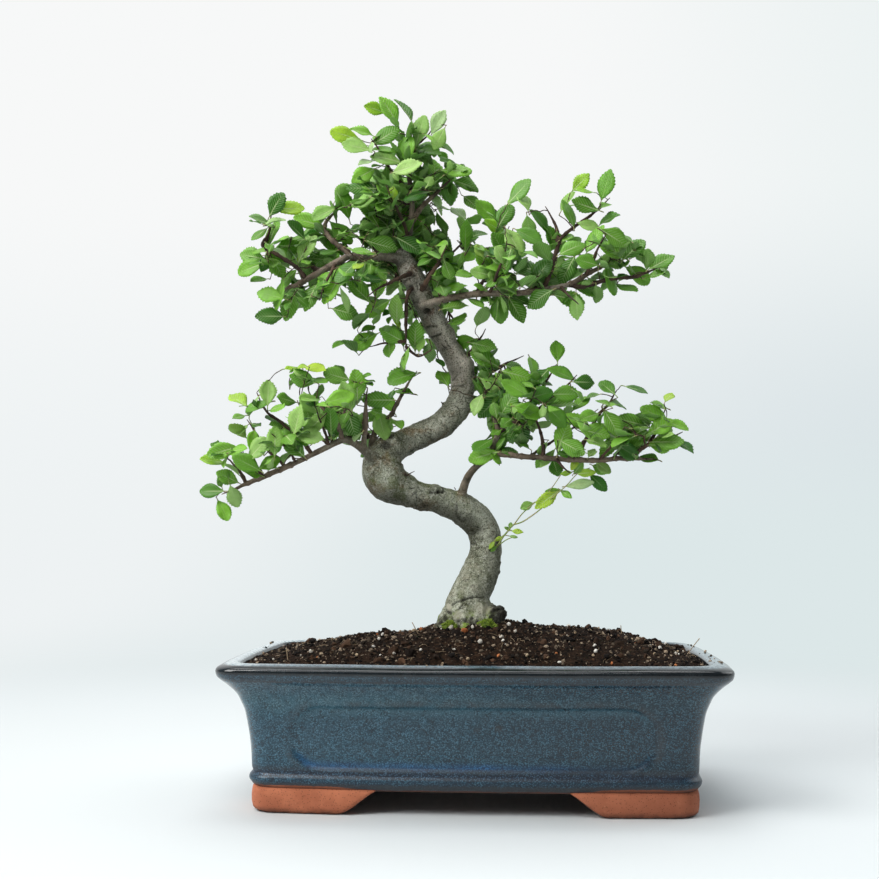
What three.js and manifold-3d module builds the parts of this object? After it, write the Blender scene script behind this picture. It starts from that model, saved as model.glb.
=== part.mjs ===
// Chinese elm bonsai in a glazed tray pot. Millimetres, +Z up, the long side of the pot along X, the front towards -Y.
import * as THREE from "three";
import { mergeVertices } from "three/addons/utils/BufferGeometryUtils.js";
import Module from "manifold-3d";

// ---- driving dimensions -------------------------------------------------
const POT_W = 300; // over the rim at the ends of the short sides, before they bow out
const POT_D = 181; // over the rim at the ends of the long sides, before they bow out
const CORNER_R = 12.5; // plan radius of the pot's corners
const RIM_BOW = 6; // how far the long sides bow out in the middle, at the rim
const SHORT_BOW = 0.6; // the short sides bow out by this share of that
const FLOOR_TOP = 21; // inside floor of the pot
const FLOOR_UNDER = 13.4; // underside of the pot, above the ground
const FOOT_THICK = 15; // thickness of the L-shaped feet
const FRONT_GAP = [76.3, 56.5]; // half-width of the gap between the front feet, at the ground and at the top
const SIDE_GAP = [42, 25]; // the same between the feet of a short side
const DRAIN_R = 9; // radius of a drainage hole
const DRAIN_X = 72; // the two holes sit at this distance each side of the centre
const PANEL = { halfLength: 108, halfHeight: 19, z: 44.6, depth: 1.5 }; // sunk panel on both long sides
const MESH_SIZE = 32; // drainage mesh, side of the square
const MESH_THICK = 1.2;
const GAP = 0.3; // clearance between touching pieces
const LEAF_THICK = 0.8;
const TWIG_R = 0.5;
const LEAVES_PER_SHOOT = 6;

// Pot section: [inset from the rim's widest line, height]. Inside floor to crest, over the lip, down the flared wall,
// the moulding at the base, the unglazed foot ring.
const POT_IN = [[33, FLOOR_TOP], [29.5, 23.5], [27.5, 31], [25.8, 46], [23, 60], [18.6, 70.5], [15, 79], [12.6, 85.6]];
const POT_OUT = [[9.6, 88.2], [4.6, 87.3], [0.9, 85.9], [0, 84], [1.2, 79.6], [4.9, 76.1], [8.2, 72.4], [10.8, 68.6], [12.9, 63.6],
  [14.8, 57.8], [16.6, 47.5], [18, 34], [18.4, 24.6], [17.2, 20.4], [17.6, 18], [19, 15.9], [18.6, 5], [20, 0]];
const POT_FOOT = [[20 + FOOT_THICK - 1.4, 0], [20 + FOOT_THICK, FLOOR_UNDER]];

// Height of the soil's ridge along X; it falls away to the rim at front and back.
const RIDGE = [[-150, 85], [-135, 86.5], [-112, 91.5], [-90, 95.5], [-68, 98.3], [-44, 100.3], [-33, 102.5], [-26, 105], [-3, 107.6],
  [18, 107.8], [29, 105.9], [51, 103.6], [75, 103], [94, 99.6], [107, 95.6], [120, 92.4], [132, 89], [142, 86], [150, 85]];
const SOIL_EDGE_Z = 85.6; // where the soil meets the inside of the rim

// Wood: centre line points [x, y, z, radius], from the piece's root to its tip.
const TRUNK = [[-4, 0, 90, 22.5], [-4, 0, 100.6, 22.3], [-3.8, 0, 106.5, 20.8],
  [-3.3, 0, 114.1, 16.9], [-2.4, 1, 121.1, 14.3], [-0.2, 3, 130.7, 13], [5.3, 7, 148.2, 10.8], [6.1, 8, 156.7, 10.3], [4.4, 8, 166.5, 10.5],
  [0.8, 6, 172.4, 10.8], [-4, 3, 176.9, 10.6], [-9.7, -1, 180.4, 10.1], [-15.4, -4, 183, 9.6], [-31.7, -12, 187.3, 8.8], [-39.3, -15, 189.4, 9.5],
  [-46.8, -17, 192.6, 11.2], [-53.8, -18.5, 196.4, 13.5], [-58.4, -18, 202.2, 14.1], [-59.9, -16, 209.4, 12.9], [-57.8, -12, 215.5, 11.3], [-53, -8, 220, 10.1],
  [-46.3, -3, 224, 8.9], [-38.8, 2, 227.7, 8.6], [-30.5, 6, 232, 8.6], [-23.5, 10, 236.6, 8.9], [-17.6, 13, 241.9, 9], [-13, 15, 248.2, 8.7],
  [-10.4, 16, 255, 8.3], [-9.4, 16, 263.8, 7.9], [-9.6, 15, 271.1, 8.3], [-11.6, 13, 277.6, 8.9], [-18.6, 8, 289.1, 7.3], [-25.1, 4, 300.6, 7.9],
  [-31.8, 0, 312.8, 7.6], [-37.5, -4, 325.4, 7.4], [-43.3, -6, 337.8, 7.4], [-46.3, -6, 343.3, 6.4], [-49, -6, 347.3, 5], [-50.3, -6, 350.1, 3.3]];
const LIMBS = {
  leader: [[-47.1, -5, 343.5, 5], [-45.3, -3, 357.5, 2.9], [-42.6, 1, 375.1, 2.2], [-42.5, 3, 383.5, 1.9], [-44.5, 6, 412, 1.3], [-43.1, 4, 440.4, 0.7]],
  lead_r: [[-42.1, 1, 372.7, 1.9], [-36, 6, 383.9, 1.6], [-29.6, 10, 391.5, 1.4], [-23.6, 13, 398.5, 1.1], [-12.2, 16, 408.9, 0.7]],
  lead_l: [[-43.3, 4, 390.7, 1.5], [-59, -8, 409.9, 1], [-63.4, -10, 418.2, 0.9], [-68.7, -11, 425.5, 0.7]],
  lead_f: [[-44.6, -3, 361.5, 1.9], [-46.4, -12, 367.3, 1.6], [-49.6, -20, 373.8, 1.3], [-53.6, -26, 380.8, 1], [-56.4, -30, 387.6, 0.8]],
  lead_b: [[-45.8, -4, 354.5, 2.1], [-38.8, 24, 375.4, 1.6], [-34.9, 36, 386.3, 1.3], [-32.7, 44, 397.8, 0.9]],
  top_r: [[-43.9, 6, 421.7, 0.9], [-32.3, 1, 430.8, 0.7], [-28, -2, 435.2, 0.6]],
  ul: [[-46.8, -8, 342.8, 5], [-51, -12, 344.3, 3.8], [-55, -14, 344.6, 3.1], [-81.2, -23, 343.5, 2.3], [-108.4, -28, 327.3, 2.1], [-114.8, -28, 324.1, 1.6], [-120.2, -27, 322.5, 1.4], [-131, -25, 315.1, 0.8]],
  ul_a: [[-81.2, -23, 343.8, 1.9], [-82.3, -22, 346.4, 1.8], [-97, -13, 360.5, 1.5], [-99.1, -9, 369, 1.3], [-95.9, -6, 375.9, 1.1], [-86.3, -3, 384.7, 0.7]],
  ul_b: [[-108.4, -28, 327.3, 1.5], [-110.8, -29, 331.7, 1.3], [-120, -31, 339.2, 1.3], [-132.1, -31, 346.9, 1.2], [-136.3, -30, 350.5, 1.6], [-132.6, -28, 360.6, 0.9], [-131.5, -26, 373.7, 0.6]],
  ul_c: [[-98.8, -27, 332.9, 1.6], [-113.7, -10, 345.4, 1.1], [-120.7, -2, 353.5, 0.9], [-125.3, 4, 361.9, 0.7]],
  ul_d: [[-74.9, -21, 343.8, 1.7], [-91.9, 0, 339.3, 1.3], [-109, 22, 330.5, 0.8]],
  ul_e: [[-89.4, -25, 338.8, 1.6], [-91.8, -34, 329.6, 1.3], [-94.5, -41, 319.7, 1.1], [-96.3, -45, 310.6, 0.8]],
  ul_f: [[-60.5, -16, 344.7, 2], [-67.2, -4, 353.5, 1.7], [-87.8, 27, 372.8, 1.2], [-97.9, 38, 381.6, 0.9]],
  back_t: [[-41, 2, 333.2, 4], [-47.8, 32, 357.1, 2.6], [-53.6, 48, 370.4, 2.1], [-59.9, 60, 383.8, 1.6], [-65.9, 68, 395.7, 1.1]],
  back_m: [[-19, 14, 291.4, 3.7], [-21.2, 28, 302.1, 3], [-25.7, 44, 313.4, 2.5], [-31.6, 58, 324, 2], [-38.8, 68, 332.6, 1.4], [-46.6, 75, 339.3, 1]],
  back_r: [[-10.6, 20, 259.6, 3.7], [-5, 34, 266.8, 3], [2.8, 48, 274.2, 2.5], [12.4, 60, 280.7, 2], [22.3, 69, 287, 1.4], [32.3, 75, 292.2, 1]],
  back_l: [[-59.7, -6, 210.7, 3.9], [-67, 10, 221.2, 3.1], [-77.1, 26, 232, 2.6], [-100.5, 52, 250, 1.6], [-111.9, 60, 256.7, 1.1]],
  cen_f: [[-36.5, -4, 322.8, 2.9], [-30.6, -20, 327.2, 2.2], [-20.4, -37, 338.2, 1.3], [-16.3, -43, 345, 0.9]],
  cen_l: [[-40.9, -7, 336.2, 2.5], [-46.5, -24, 329.2, 1.9], [-59.4, -41, 318.6, 1.3], [-66.2, -47, 312.3, 0.9]],
  hang: [[-38.3, -6, 327, 2], [-42.7, -12, 322.5, 2], [-44.4, -14, 316.8, 1.7], [-44.9, -15, 282.4, 1]],
  hang_l: [[-44.8, -15, 288.9, 1.1], [-59.2, -14, 287.9, 0.9], [-68.4, -13, 285.9, 0.7]],
  hang_r: [[-44.9, -15, 285.6, 1], [-40.6, -16, 280.9, 1], [-35.3, -17, 278.7, 0.9], [-27.5, -18, 283, 0.7]],
  ur: [[-35.5, -8, 313.2, 3.9], [-23.7, -17, 314.6, 2.7], [-7.2, -22, 316.7, 2.4], [1.2, -23, 317.6, 2.3], [27.2, -26, 317.1, 2.2], [47.7, -26, 319.6, 2], [62.5, -24, 323.3, 1.8], [78.9, -20, 333.5, 1.3], [97.7, -14, 343.1, 0.7]],
  ur_a: [[44.1, -26, 319, 1.7], [54.7, -13, 352.6, 1.4], [53.1, -9, 364.7, 1], [46.3, -5, 379.6, 0.7]],
  ur_a2: [[55, -13, 354, 1.2], [59.7, -10, 360, 1.1], [71.9, -4, 370, 1], [89.5, 2, 386.2, 0.6]],
  ur_b: [[61.4, -24, 323.1, 1.5], [65.8, -24, 321.4, 1.5], [71.6, -23, 321.9, 1.4], [91.3, -19, 327.7, 1.2], [102.8, -16, 328.8, 1.1], [122.8, -10, 338.4, 0.6]],
  ur_c: [[10, -24, 317.7, 1.8], [16.3, -41, 329.6, 1.3], [19.6, -47, 337.1, 1], [21.5, -51, 345.5, 0.7]],
  ur_d: [[1.2, -23, 317.6, 1.9], [9, 6, 339.8, 1.4], [13.4, 20, 352.6, 1.2], [18.1, 31, 365.7, 1], [22.2, 38, 378, 0.8]],
  ur_e: [[37.1, -26, 318.1, 1.7], [50.8, 2, 335.6, 1.3], [59.2, 15, 345.2, 1.1], [68.6, 26, 354.6, 0.8]],
  ur_f: [[55.6, -25, 321.3, 1.4], [58.4, -34, 315.2, 1.2], [65.2, -47, 305.5, 0.7]],
  ur_g: [[18.6, -25, 317.2, 1.5], [32.1, 8, 313.5, 0.9]],
  ur_h: [[71.7, -22, 329.2, 1.2], [78.8, -33, 344, 0.9], [83.7, -36, 352.2, 0.7]],
  kr: [[-33.7, -6, 328.3, 2.1], [-30, -2, 335.9, 1.9], [-11.5, 15, 358.7, 1.1], [-5.6, 20, 368.2, 0.8]],
  mid_r: [[-11.6, 14, 279.1, 2.7], [-5.4, 10, 283.2, 2.1], [7, -2, 298.5, 0.9]],
  ll: [[-59.2, -22, 207.1, 4.8], [-63.1, -27, 211.3, 3.8], [-71.4, -33, 218.2, 2.9], [-78.4, -37, 222.3, 2.5], [-82.4, -38, 222.6, 2.3], [-100.9, -40, 213.6, 1.9], [-121.9, -40, 203.9, 1.7], [-143.3, -38, 195.1, 1.4], [-159.8, -35, 189, 0.7]],
  ll_a: [[-66.1, -24, 210.9, 3.2], [-69.8, -28, 218.3, 2.2], [-70, -29, 224.6, 1.9], [-68.9, -30, 239.8, 1.5], [-68.2, -27, 256.8, 1]],
  ll_b: [[-64.9, -18, 212.6, 3.2], [-66.5, -18, 221, 2.1], [-64.7, -17, 228.8, 1.8], [-62.1, -15, 235.5, 1.6], [-54.9, -12, 240.9, 1.4], [-48.5, -8, 253.8, 1.1], [-38.4, -4, 270.8, 0.7]],
  ll_c: [[-82.4, -38, 222.6, 1.8], [-83, -45, 233.9, 1.2], [-80.1, -48, 239.2, 1.1], [-78, -50, 245.9, 0.8]],
  ll_d: [[-143.3, -38, 195.1, 1.3], [-149.2, -36, 204.7, 1], [-160.1, -34, 213.2, 0.6]],
  ll_e: [[-118.4, -40, 205.6, 1.3], [-122.9, -37, 211.5, 1.1], [-128.6, -34, 215.1, 1], [-134.5, -31, 221.6, 0.9], [-146.4, -25, 237, 0.6]],
  ll_f: [[-101.3, -40, 213.4, 1.4], [-106.1, -42, 220.5, 1.2], [-119.8, -44, 233, 0.9], [-128.7, -44, 239.4, 0.8], [-136.3, -42, 252.9, 0.6]],
  ll_g: [[-90.6, -39, 218.8, 1.6], [-106.2, -17, 234.9, 1.2], [-113.3, -7, 243.8, 1], [-118.9, 1, 252.8, 0.7]],
  ll_h: [[-74.4, -35, 220.3, 1.9], [-93.2, -8, 238.3, 1.4], [-111.4, 16, 257.2, 0.8]],
  ll_i: [[-90.6, -39, 218.8, 1.5], [-93.8, -56, 233.5, 1], [-95.9, -62, 240.9, 0.8]],
  ll_j: [[-111.4, -40, 208.4, 1.3], [-113.4, -50, 214.3, 1.1], [-117.5, -58, 219.3, 0.9], [-121.9, -64, 224.3, 0.6]],
  ll_k: [[-132.5, -39, 199.5, 1.2], [-134.9, -46, 205.3, 1], [-138.6, -52, 210, 0.8], [-142.7, -56, 214, 0.6]],
  lr: [[-9, -2, 180.7, 4.6], [-8.1, -6, 192.3, 3], [-5.8, -8, 198.7, 2.7], [-3.1, -9, 203.2, 2.5], [7, -11, 212.1, 2.3], [10.9, -11, 217.9, 2.1], [14.8, -9, 229.7, 1.7], [5.6, -1, 260.8, 0.9]],
  lr_h: [[7, -11, 212.1, 2.1], [14, -14, 215.1, 1.9], [20, -17, 214.4, 1.7], [34.6, -21, 212.5, 1.7], [51.6, -23, 211.1, 1.6], [69.8, -23, 210.2, 1.6], [87, -21, 211, 1.5], [112.7, -15, 211.1, 1.1], [115.3, -14, 212, 0.8]],
  lr_a: [[43.4, -22, 212.1, 1.4], [42.8, -26, 225.5, 1.1], [36.6, -30, 241, 0.7]],
  lr_b: [[61.6, -23, 210.4, 1.5], [67.3, -25, 217.8, 1.3], [76.1, -27, 234.7, 1.1], [80, -27, 240.3, 1], [84.1, -26, 244.4, 0.9], [91, -24, 254.8, 0.7]],
  lr_c: [[14.8, -9, 229.7, 1.6], [46.9, -20, 247.1, 1.1], [65.3, -24, 264.1, 0.7]],
  lr_d: [[31.6, -15, 238.7, 1.2], [43, -9, 257.1, 1], [53.3, -5, 274.4, 0.7]],
  lr_e: [[98.4, -19, 211.4, 1.3], [110.4, -18, 220.7, 1.1], [122.4, -12, 244.2, 0.6]],
  lr_f: [[110.4, -18, 220.7, 1], [125.6, -14, 225.4, 0.8], [132.3, -12, 228.7, 0.6]],
  lr_g: [[34.6, -21, 212.5, 1.4], [51.9, 4, 225.4, 1.2], [72.9, 27, 240.7, 0.9], [82.3, 36, 249.1, 0.7]],
  lr_h2: [[78.5, -22, 210.4, 1.3], [83.7, -32, 215.9, 1.1], [88.7, -40, 222.1, 0.9], [93.1, -46, 229, 0.7]],
  lr_i: [[12.8, -10, 223.8, 1.6], [25.1, 15, 239.2, 1.3], [31.9, 27, 248.5, 1.1], [38.1, 37, 258.5, 0.8]],
  lr_j: [[87, -21, 211, 1.2], [101.1, 1, 226.2, 0.9], [108.7, 11, 234.9, 0.7]],
  lr_k: [[51.6, -23, 211.1, 1.1], [55.1, -30, 206.2, 0.9], [59.8, -36, 201.4, 0.7]],
  th_a: [[9.7, 4, 154.1, 1.1], [17.6, -4, 163.2, 0.8], [30, -12, 177.8, 0.7], [53.5, -20, 199.8, 0.5]],
  th_b: [[24.2, -9, 171.2, 0.6], [28.7, -12, 172.7, 0.6], [35.1, -15, 176.5, 0.6], [42, -17, 180.6, 0.5], [54.7, -21, 190.9, 0.4]],
};
// Surface roots: they leave the flare and dive into the soil.
const ROOTS = [
  [[-12, -6, 113, 5.6], [-20, -13, 106.4, 4.8], [-29, -18, 99.5, 3]],
  [[5, -6, 113.5, 5.4], [12, -13, 107.2, 4.6], [20, -18, 100.5, 2.8]],
  [[4, 6, 114, 6.5], [13, 13, 106, 5], [24, 20, 98, 3]],
  [[-12, 8, 113, 5.6], [-20, 17, 104.8, 4.8], [-28, 26, 96.5, 3]],
  [[-5, -12, 112, 5.6], [-6, -21, 105.8, 4.6], [-7, -30, 99, 2.8]],
];
const MOSS = [
  ["moss_left", [-16, -22.5, 105.6], [5.2, 4.6, 4.2]],
  ["moss_right", [7.5, -22.5, 106.2], [6.6, 4.8, 4.8]],
];

// Leafy shoots: [name, [x, y, z, radius] of the wood it springs from, [x, y, z] of its tip,
//   leaves as [base x, y, z, midrib direction x, y, z, upper face normal x, y, z, length, width]].
const SHOOTS = [
  ["shoot_crown_1", [-44, 6, 419.3, 1.1], [-45.7, -2.2, 419.2], [
    [-75.3, -10.8, 424.9, -0.93, -0.28, 0.24, 0.29, -0.96, 0, 22.3, 11.1],
    [-23.2, 0.8, 407, 0.97, 0.26, 0.02, 0.22, -0.85, 0.48, 22.6, 13.3],
    [-50.7, 19.6, 429.9, -0.5, 0.86, 0.05, -0.27, -0.21, 0.94, 16.2, 9],
    [-53.5, -19.9, 399.3, 0.96, -0.15, 0.24, -0.2, -0.96, 0.2, 22, 11.4],
    [-41.7, -6, 437.9, -0.5, 0.09, 0.86, 0.72, -0.52, 0.47, 22.5, 12.5],
    [-52, 3.8, 399.4, -0.86, 0.1, 0.5, 0.2, -0.84, 0.5, 22.8, 13.6],
    [-33.7, -8.9, 428.7, 0.55, -0.61, -0.57, 0.36, -0.44, 0.82, 11, 5.8],
    [-66.2, -11.5, 410.5, -0.65, -0.72, -0.24, 0.12, -0.42, 0.9, 13.6, 8.2],
    [-68.9, -4.1, 423.7, 0.86, -0.18, 0.47, -0.26, -0.96, 0.11, 22.5, 11.7],
    [-26.4, 10.7, 423.9, 0.58, 0.76, -0.3, 0.09, 0.31, 0.95, 11.3, 6.2],
    [-46.5, 15.4, 401.7, 0.56, -0.69, 0.45, -0.49, 0.17, 0.86, 16.9, 9.9],
    [-59.8, -5.2, 445.2, -0.86, -0.47, 0.2, 0.47, -0.88, -0.04, 15.2, 8.5],
    [-45.5, -1.3, 409.5, 0.02, -0.28, 0.96, -0.52, -0.82, -0.23, 22.5, 13.4],
    [-21.3, -6.5, 400.6, -0.72, -0.2, -0.67, -0.55, -0.43, 0.72, 12.9, 6.3],
    [-44.1, 20.1, 422.5, 0.89, -0.37, -0.27, 0.05, -0.5, 0.86, 16.1, 8.9],
    [-43.4, 5.1, 424.5, 0.96, -0.11, -0.27, 0.04, -0.86, 0.5, 22.7, 13.3],
  ]],
  ["shoot_crown_2", [-35.4, 34.5, 385, 1.3], [-37.6, 27.3, 392.6], [
    [-14.8, 4.9, 401.2, 0.89, 0.39, -0.22, 0.45, -0.83, 0.34, 20.3, 11.1],
    [-57.7, 14.3, 380, -0.62, 0.47, 0.63, 0.5, -0.38, 0.78, 20.3, 12],
    [-45.8, 50.3, 399.3, 0.77, 0.32, 0.55, -0.63, 0.26, 0.73, 17.2, 9.5],
    [-27.4, 25.7, 385.5, 0.31, 0.76, -0.57, 0.66, 0.25, 0.7, 20.2, 11.9],
    [-35.5, 15.5, 417.2, -0.05, 0.75, -0.66, -0.73, 0.43, 0.53, 11.4, 5.8],
    [-35.2, 7, 386.8, 0.15, 0.64, 0.75, -0.62, -0.53, 0.57, 11.2, 5.3],
    [-55.8, 30.8, 393.6, 0.25, 0.13, 0.96, -0.02, -0.99, 0.14, 23.5, 11.6],
    [-22.3, 21.8, 410.7, 0.24, 0.29, -0.93, 0.58, -0.81, -0.11, 23.2, 13.2],
    [-40.1, 28.4, 375.6, -0.62, 0.78, 0.06, -0.29, -0.31, 0.91, 18.4, 10.9],
    [-44.4, 11.1, 365.8, 0.68, 0.18, 0.71, -0.15, -0.91, 0.38, 22.9, 12.7],
    [-44.5, 30.6, 386.1, 0.41, -0.71, 0.57, -0.48, 0.36, 0.8, 17.1, 9.8],
    [-38.6, 45.4, 388, -0.27, 0.85, -0.46, -0.15, 0.43, 0.89, 12.7, 7.6],
    [-65.7, 16, 403.2, 0.77, 0.46, -0.43, 0.63, -0.45, 0.64, 13.3, 7.9],
    [-6.7, 22.6, 378.6, -0.6, 0.51, 0.62, 0.11, -0.71, 0.69, 18, 8.9],
    [-59.4, 40, 384, 0.5, 0.37, 0.78, -0.85, 0.01, 0.53, 18.2, 9.9],
    [-51.2, 15.5, 368.5, -0.01, 0.11, 0.99, 0.57, -0.82, 0.1, 23, 13.1],
  ]],
  ["shoot_crown_3", [-61.6, 62.3, 387.2, 1.4], [-59.3, 65.6, 385.1], [
    [-54.5, 69.7, 411.7, -0.84, -0.25, 0.49, -0.04, 0.91, 0.4, 15, 8.4],
    [-60.9, 75.2, 354, 0.79, 0.44, 0.43, -0.2, -0.47, 0.86, 14.1, 7.8],
    [-75.5, 47.1, 382.5, 0.24, 0.05, -0.97, 0.72, 0.66, 0.21, 17.2, 10.3],
    [-28.3, 52.1, 376.9, -0.24, 0.95, 0.2, 0.26, -0.13, 0.96, 15.5, 8.1],
    [-82.2, 70, 386.8, 0.25, 0.66, 0.71, 0.14, 0.7, -0.7, 14.2, 8],
    [-46.2, 74, 387.9, -0.83, 0.56, 0.04, 0.35, 0.46, 0.82, 18.6, 9.6],
    [-50.4, 48.8, 393.9, -0.54, 0.83, -0.13, -0.26, -0.01, 0.96, 13.3, 6.8],
    [-76.7, 47.5, 401.5, -0.39, 0.92, -0.09, 0.06, 0.13, 0.99, 16.3, 8.9],
    [-67.8, 60.1, 382.5, 0.23, 0.91, -0.36, 0.05, 0.36, 0.93, 13.2, 7.1],
    [-52.3, 59.1, 366.4, 0.54, 0.6, 0.6, -0.55, -0.29, 0.78, 19.1, 9.9],
    [-65.3, 74.5, 373.3, -0.92, 0.36, 0.14, 0.16, 0, 0.99, 18.5, 9.6],
    [-67, 42, 387.7, 0.17, 0.98, 0.05, 0.09, -0.07, 0.99, 13.1, 7],
    [-43.1, 59.1, 408.2, -0.71, 0.7, -0.07, 0.06, 0.16, 0.99, 18.2, 8.9],
    [-40.4, 65.5, 378.6, -0.15, 0.98, 0.15, -0.04, -0.16, 0.99, 17.4, 9.1],
    [-68.3, 70.7, 384.9, 0.08, 0.97, 0.25, -0.59, -0.15, 0.79, 17.8, 10.5],
    [-36.4, 65, 386.5, -0.69, -0.61, 0.38, 0.23, 0.31, 0.92, 18.6, 9.3],
  ]],
  ["shoot_crown_4", [-50.4, -21.2, 375.2, 1.3], [-62.9, -10, 377.8], [
    [-77.7, -38.6, 374.4, 0.6, -0.8, -0.05, -0.32, -0.3, 0.9, 16.2, 9.7],
    [-55.4, 12.7, 380.4, -0.47, -0.3, 0.83, 0.28, -0.94, -0.18, 22.8, 11.3],
    [-40.2, -23.8, 386.1, 0.81, -0.49, 0.32, -0.25, 0.2, 0.95, 12.6, 7],
    [-75.7, -6.1, 363, 0.25, -0.47, -0.85, 0.71, -0.51, 0.49, 14.3, 7.7],
    [-93.1, -7, 384.7, 0.65, -0.49, 0.58, -0.21, 0.61, 0.76, 15.9, 8.9],
    [-40, -5.2, 372.5, -0.71, 0.22, -0.67, -0.51, -0.82, 0.26, 16.7, 8.4],
    [-52.9, -22.4, 364.9, 0.44, -0.82, -0.37, 0.7, 0.06, 0.71, 18, 9.6],
    [-67.7, 5.8, 361.6, 0.15, 0.64, 0.75, -0.73, -0.45, 0.52, 11.2, 6.6],
    [-60, -8.3, 393.4, -0.53, -0.61, 0.59, 0.5, 0.34, 0.8, 13, 6.8],
    [-52, -34.6, 385.7, -0.55, -0.82, 0.13, 0.15, 0.06, 0.99, 13.7, 7.3],
    [-63.8, -10.1, 367, -0.5, 0.09, 0.86, 0.46, -0.82, 0.35, 22.3, 13.2],
    [-55.1, -18.9, 379.8, -0.49, -0.72, -0.5, 0.11, -0.61, 0.78, 14.7, 8.8],
    [-68.4, -21.7, 360.3, 0.31, -0.94, -0.16, 0.06, -0.15, 0.99, 14.6, 7.7],
    [-62.3, -2.1, 396.3, -0.55, 0.61, 0.57, 0.26, -0.52, 0.81, 13.9, 7.8],
    [-50.3, -7.1, 387.1, 0.16, -0.97, 0.18, 0.23, 0.21, 0.95, 17.8, 10.3],
    [-53.4, 0.6, 357.7, -0.46, -0.76, 0.45, 0.36, 0.31, 0.88, 11, 6.5],
  ]],
  ["shoot_crown_5", [-49, 35.2, 359.8, 2.5], [-51.7, 34.7, 357.6], [
    [-64, 29.2, 381.5, -0.21, 0.94, 0.27, -0, -0.28, 0.96, 14.1, 7.9],
    [-46.4, 16.1, 342.5, 0.34, 0.94, -0.08, 0.1, 0.05, 0.99, 16.2, 8.5],
    [-42.5, 47.7, 361.8, 0.18, 0.98, 0.11, -0.1, -0.09, 0.99, 12.5, 6.7],
    [-68.1, 29, 349.8, -0.05, 0.35, 0.94, 0.77, -0.58, 0.25, 12.5, 6.3],
    [-47.8, 28.7, 369.8, 0.61, -0.71, -0.35, 0.26, -0.23, 0.94, 14.7, 7.5],
    [-55.2, 7.7, 363.5, -0.74, 0.63, -0.23, -0.03, 0.3, 0.95, 13.8, 7.8],
    [-57.4, 37.3, 345.7, -0.2, 0.98, -0.07, 0.22, 0.12, 0.97, 19.4, 10.5],
    [-42.1, 34.6, 347.8, 0.63, 0.68, 0.37, -0.56, 0.07, 0.82, 14.1, 6.8],
    [-52, 36.1, 375.1, -0.3, 0.95, -0.12, 0.46, 0.26, 0.85, 16.2, 9.7],
    [-49.2, 33, 352.8, -0.49, 0.57, 0.66, 0.63, 0.76, -0.18, 14.8, 7.4],
    [-74.2, 11, 365.1, 0.05, 0.99, -0.14, 0.18, 0.13, 0.98, 18.5, 10.5],
    [-39.8, 35.1, 362.7, 0.23, 0.72, 0.66, -0.72, -0.33, 0.61, 13.6, 7.4],
    [-52.7, 26.9, 339.2, -0, 1, 0.01, 0.27, -0, 0.96, 17, 8.6],
    [-61.2, 14.4, 377.5, -0.34, 0.94, -0, -0.16, -0.06, 0.99, 18.8, 10.4],
    [-58.8, 14.9, 348.6, 0.54, 0.82, 0.19, -0.09, -0.17, 0.98, 15.2, 7.4],
    [-67.2, 37.2, 362.2, -0.27, 0.93, -0.25, 0.11, 0.28, 0.95, 15.3, 9.1],
  ]],
  ["shoot_crown_6", [-23.7, 4.2, 344.5, 1.6], [-30.9, 5.6, 348.4], [
    [-33.1, -24.9, 351.5, -0.01, -0.95, -0.3, 0.3, -0.29, 0.91, 13, 7],
    [-17.4, 25.9, 353.2, -0.47, -0.3, 0.83, 0.6, -0.8, 0.05, 23.1, 13.4],
    [-42.1, 12, 325.7, 0.34, 0.82, 0.46, -0.82, 0.02, 0.57, 14.6, 8.5],
    [-6.1, -16.6, 346.8, 0.02, -0.28, 0.96, 0.7, -0.68, -0.21, 21.9, 11.3],
    [-44.2, 2.1, 361.1, 0.74, -0.65, 0.13, -0.57, -0.53, 0.62, 11, 5.3],
    [-12, 2.1, 338, 0.27, 0.96, 0.12, -0.01, -0.12, 0.99, 14.4, 8.6],
    [-43, 8.9, 345.5, 0.93, 0.24, 0.27, 0.22, -0.97, 0.1, 22.8, 11.3],
    [-23, -4.6, 348.9, -0.28, -0.93, 0.24, 0.84, -0.12, 0.53, 14, 7],
    [-27.3, -2.3, 323.3, 0.41, -0.32, 0.85, 0.23, -0.87, -0.43, 18.8, 10.3],
    [-44.7, 7.1, 342.4, -0.47, -0.3, 0.83, 0.41, -0.91, -0.1, 19.5, 10],
    [-51.2, -17.6, 357, 0.86, -0.1, -0.5, 0.07, -0.95, 0.31, 21.9, 11.4],
    [-17.9, 9.4, 349.3, -0.18, -0.98, 0.12, -0.26, 0.16, 0.95, 13.8, 7.8],
    [-26.8, -0.3, 338.9, -0.41, 0.71, -0.57, -0.54, 0.31, 0.78, 11.1, 5.7],
    [-40.1, 11.6, 363, 0.93, -0.29, 0.24, -0.17, 0.26, 0.95, 15.9, 8.1],
    [-26, 11.9, 345.8, 0.76, 0.65, 0.01, -0.12, 0.12, 0.98, 13.8, 7.9],
    [-16.2, 13.6, 350.6, 0.79, -0.56, -0.25, -0.2, -0.63, 0.75, 21.1, 11.7],
  ]],
  ["shoot_crown_7", [-36.7, 65.1, 330.2, 1.6], [-37.2, 63.1, 331.3], [
    [-31.8, 70.9, 309.6, 0.84, 0.27, -0.47, 0.13, 0.74, 0.66, 15.5, 9],
    [-55.8, 74.2, 346.2, -0.17, 0.97, -0.2, 0.25, 0.23, 0.94, 13.7, 8],
    [-34.7, 29.8, 335.1, 0.33, 0.93, 0.17, 0.03, -0.19, 0.98, 17.4, 10.4],
    [-27.8, 62.3, 342.4, 0.38, 0.91, -0.15, 0.05, 0.14, 0.99, 17.6, 9],
    [-51.9, 45.1, 328.6, -0.22, 0.97, 0.06, -0.36, -0.14, 0.92, 16.4, 9.3],
    [-43.4, 46.3, 311.8, 0.39, 0.92, -0.08, -0.24, 0.18, 0.95, 19.2, 10.9],
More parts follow.
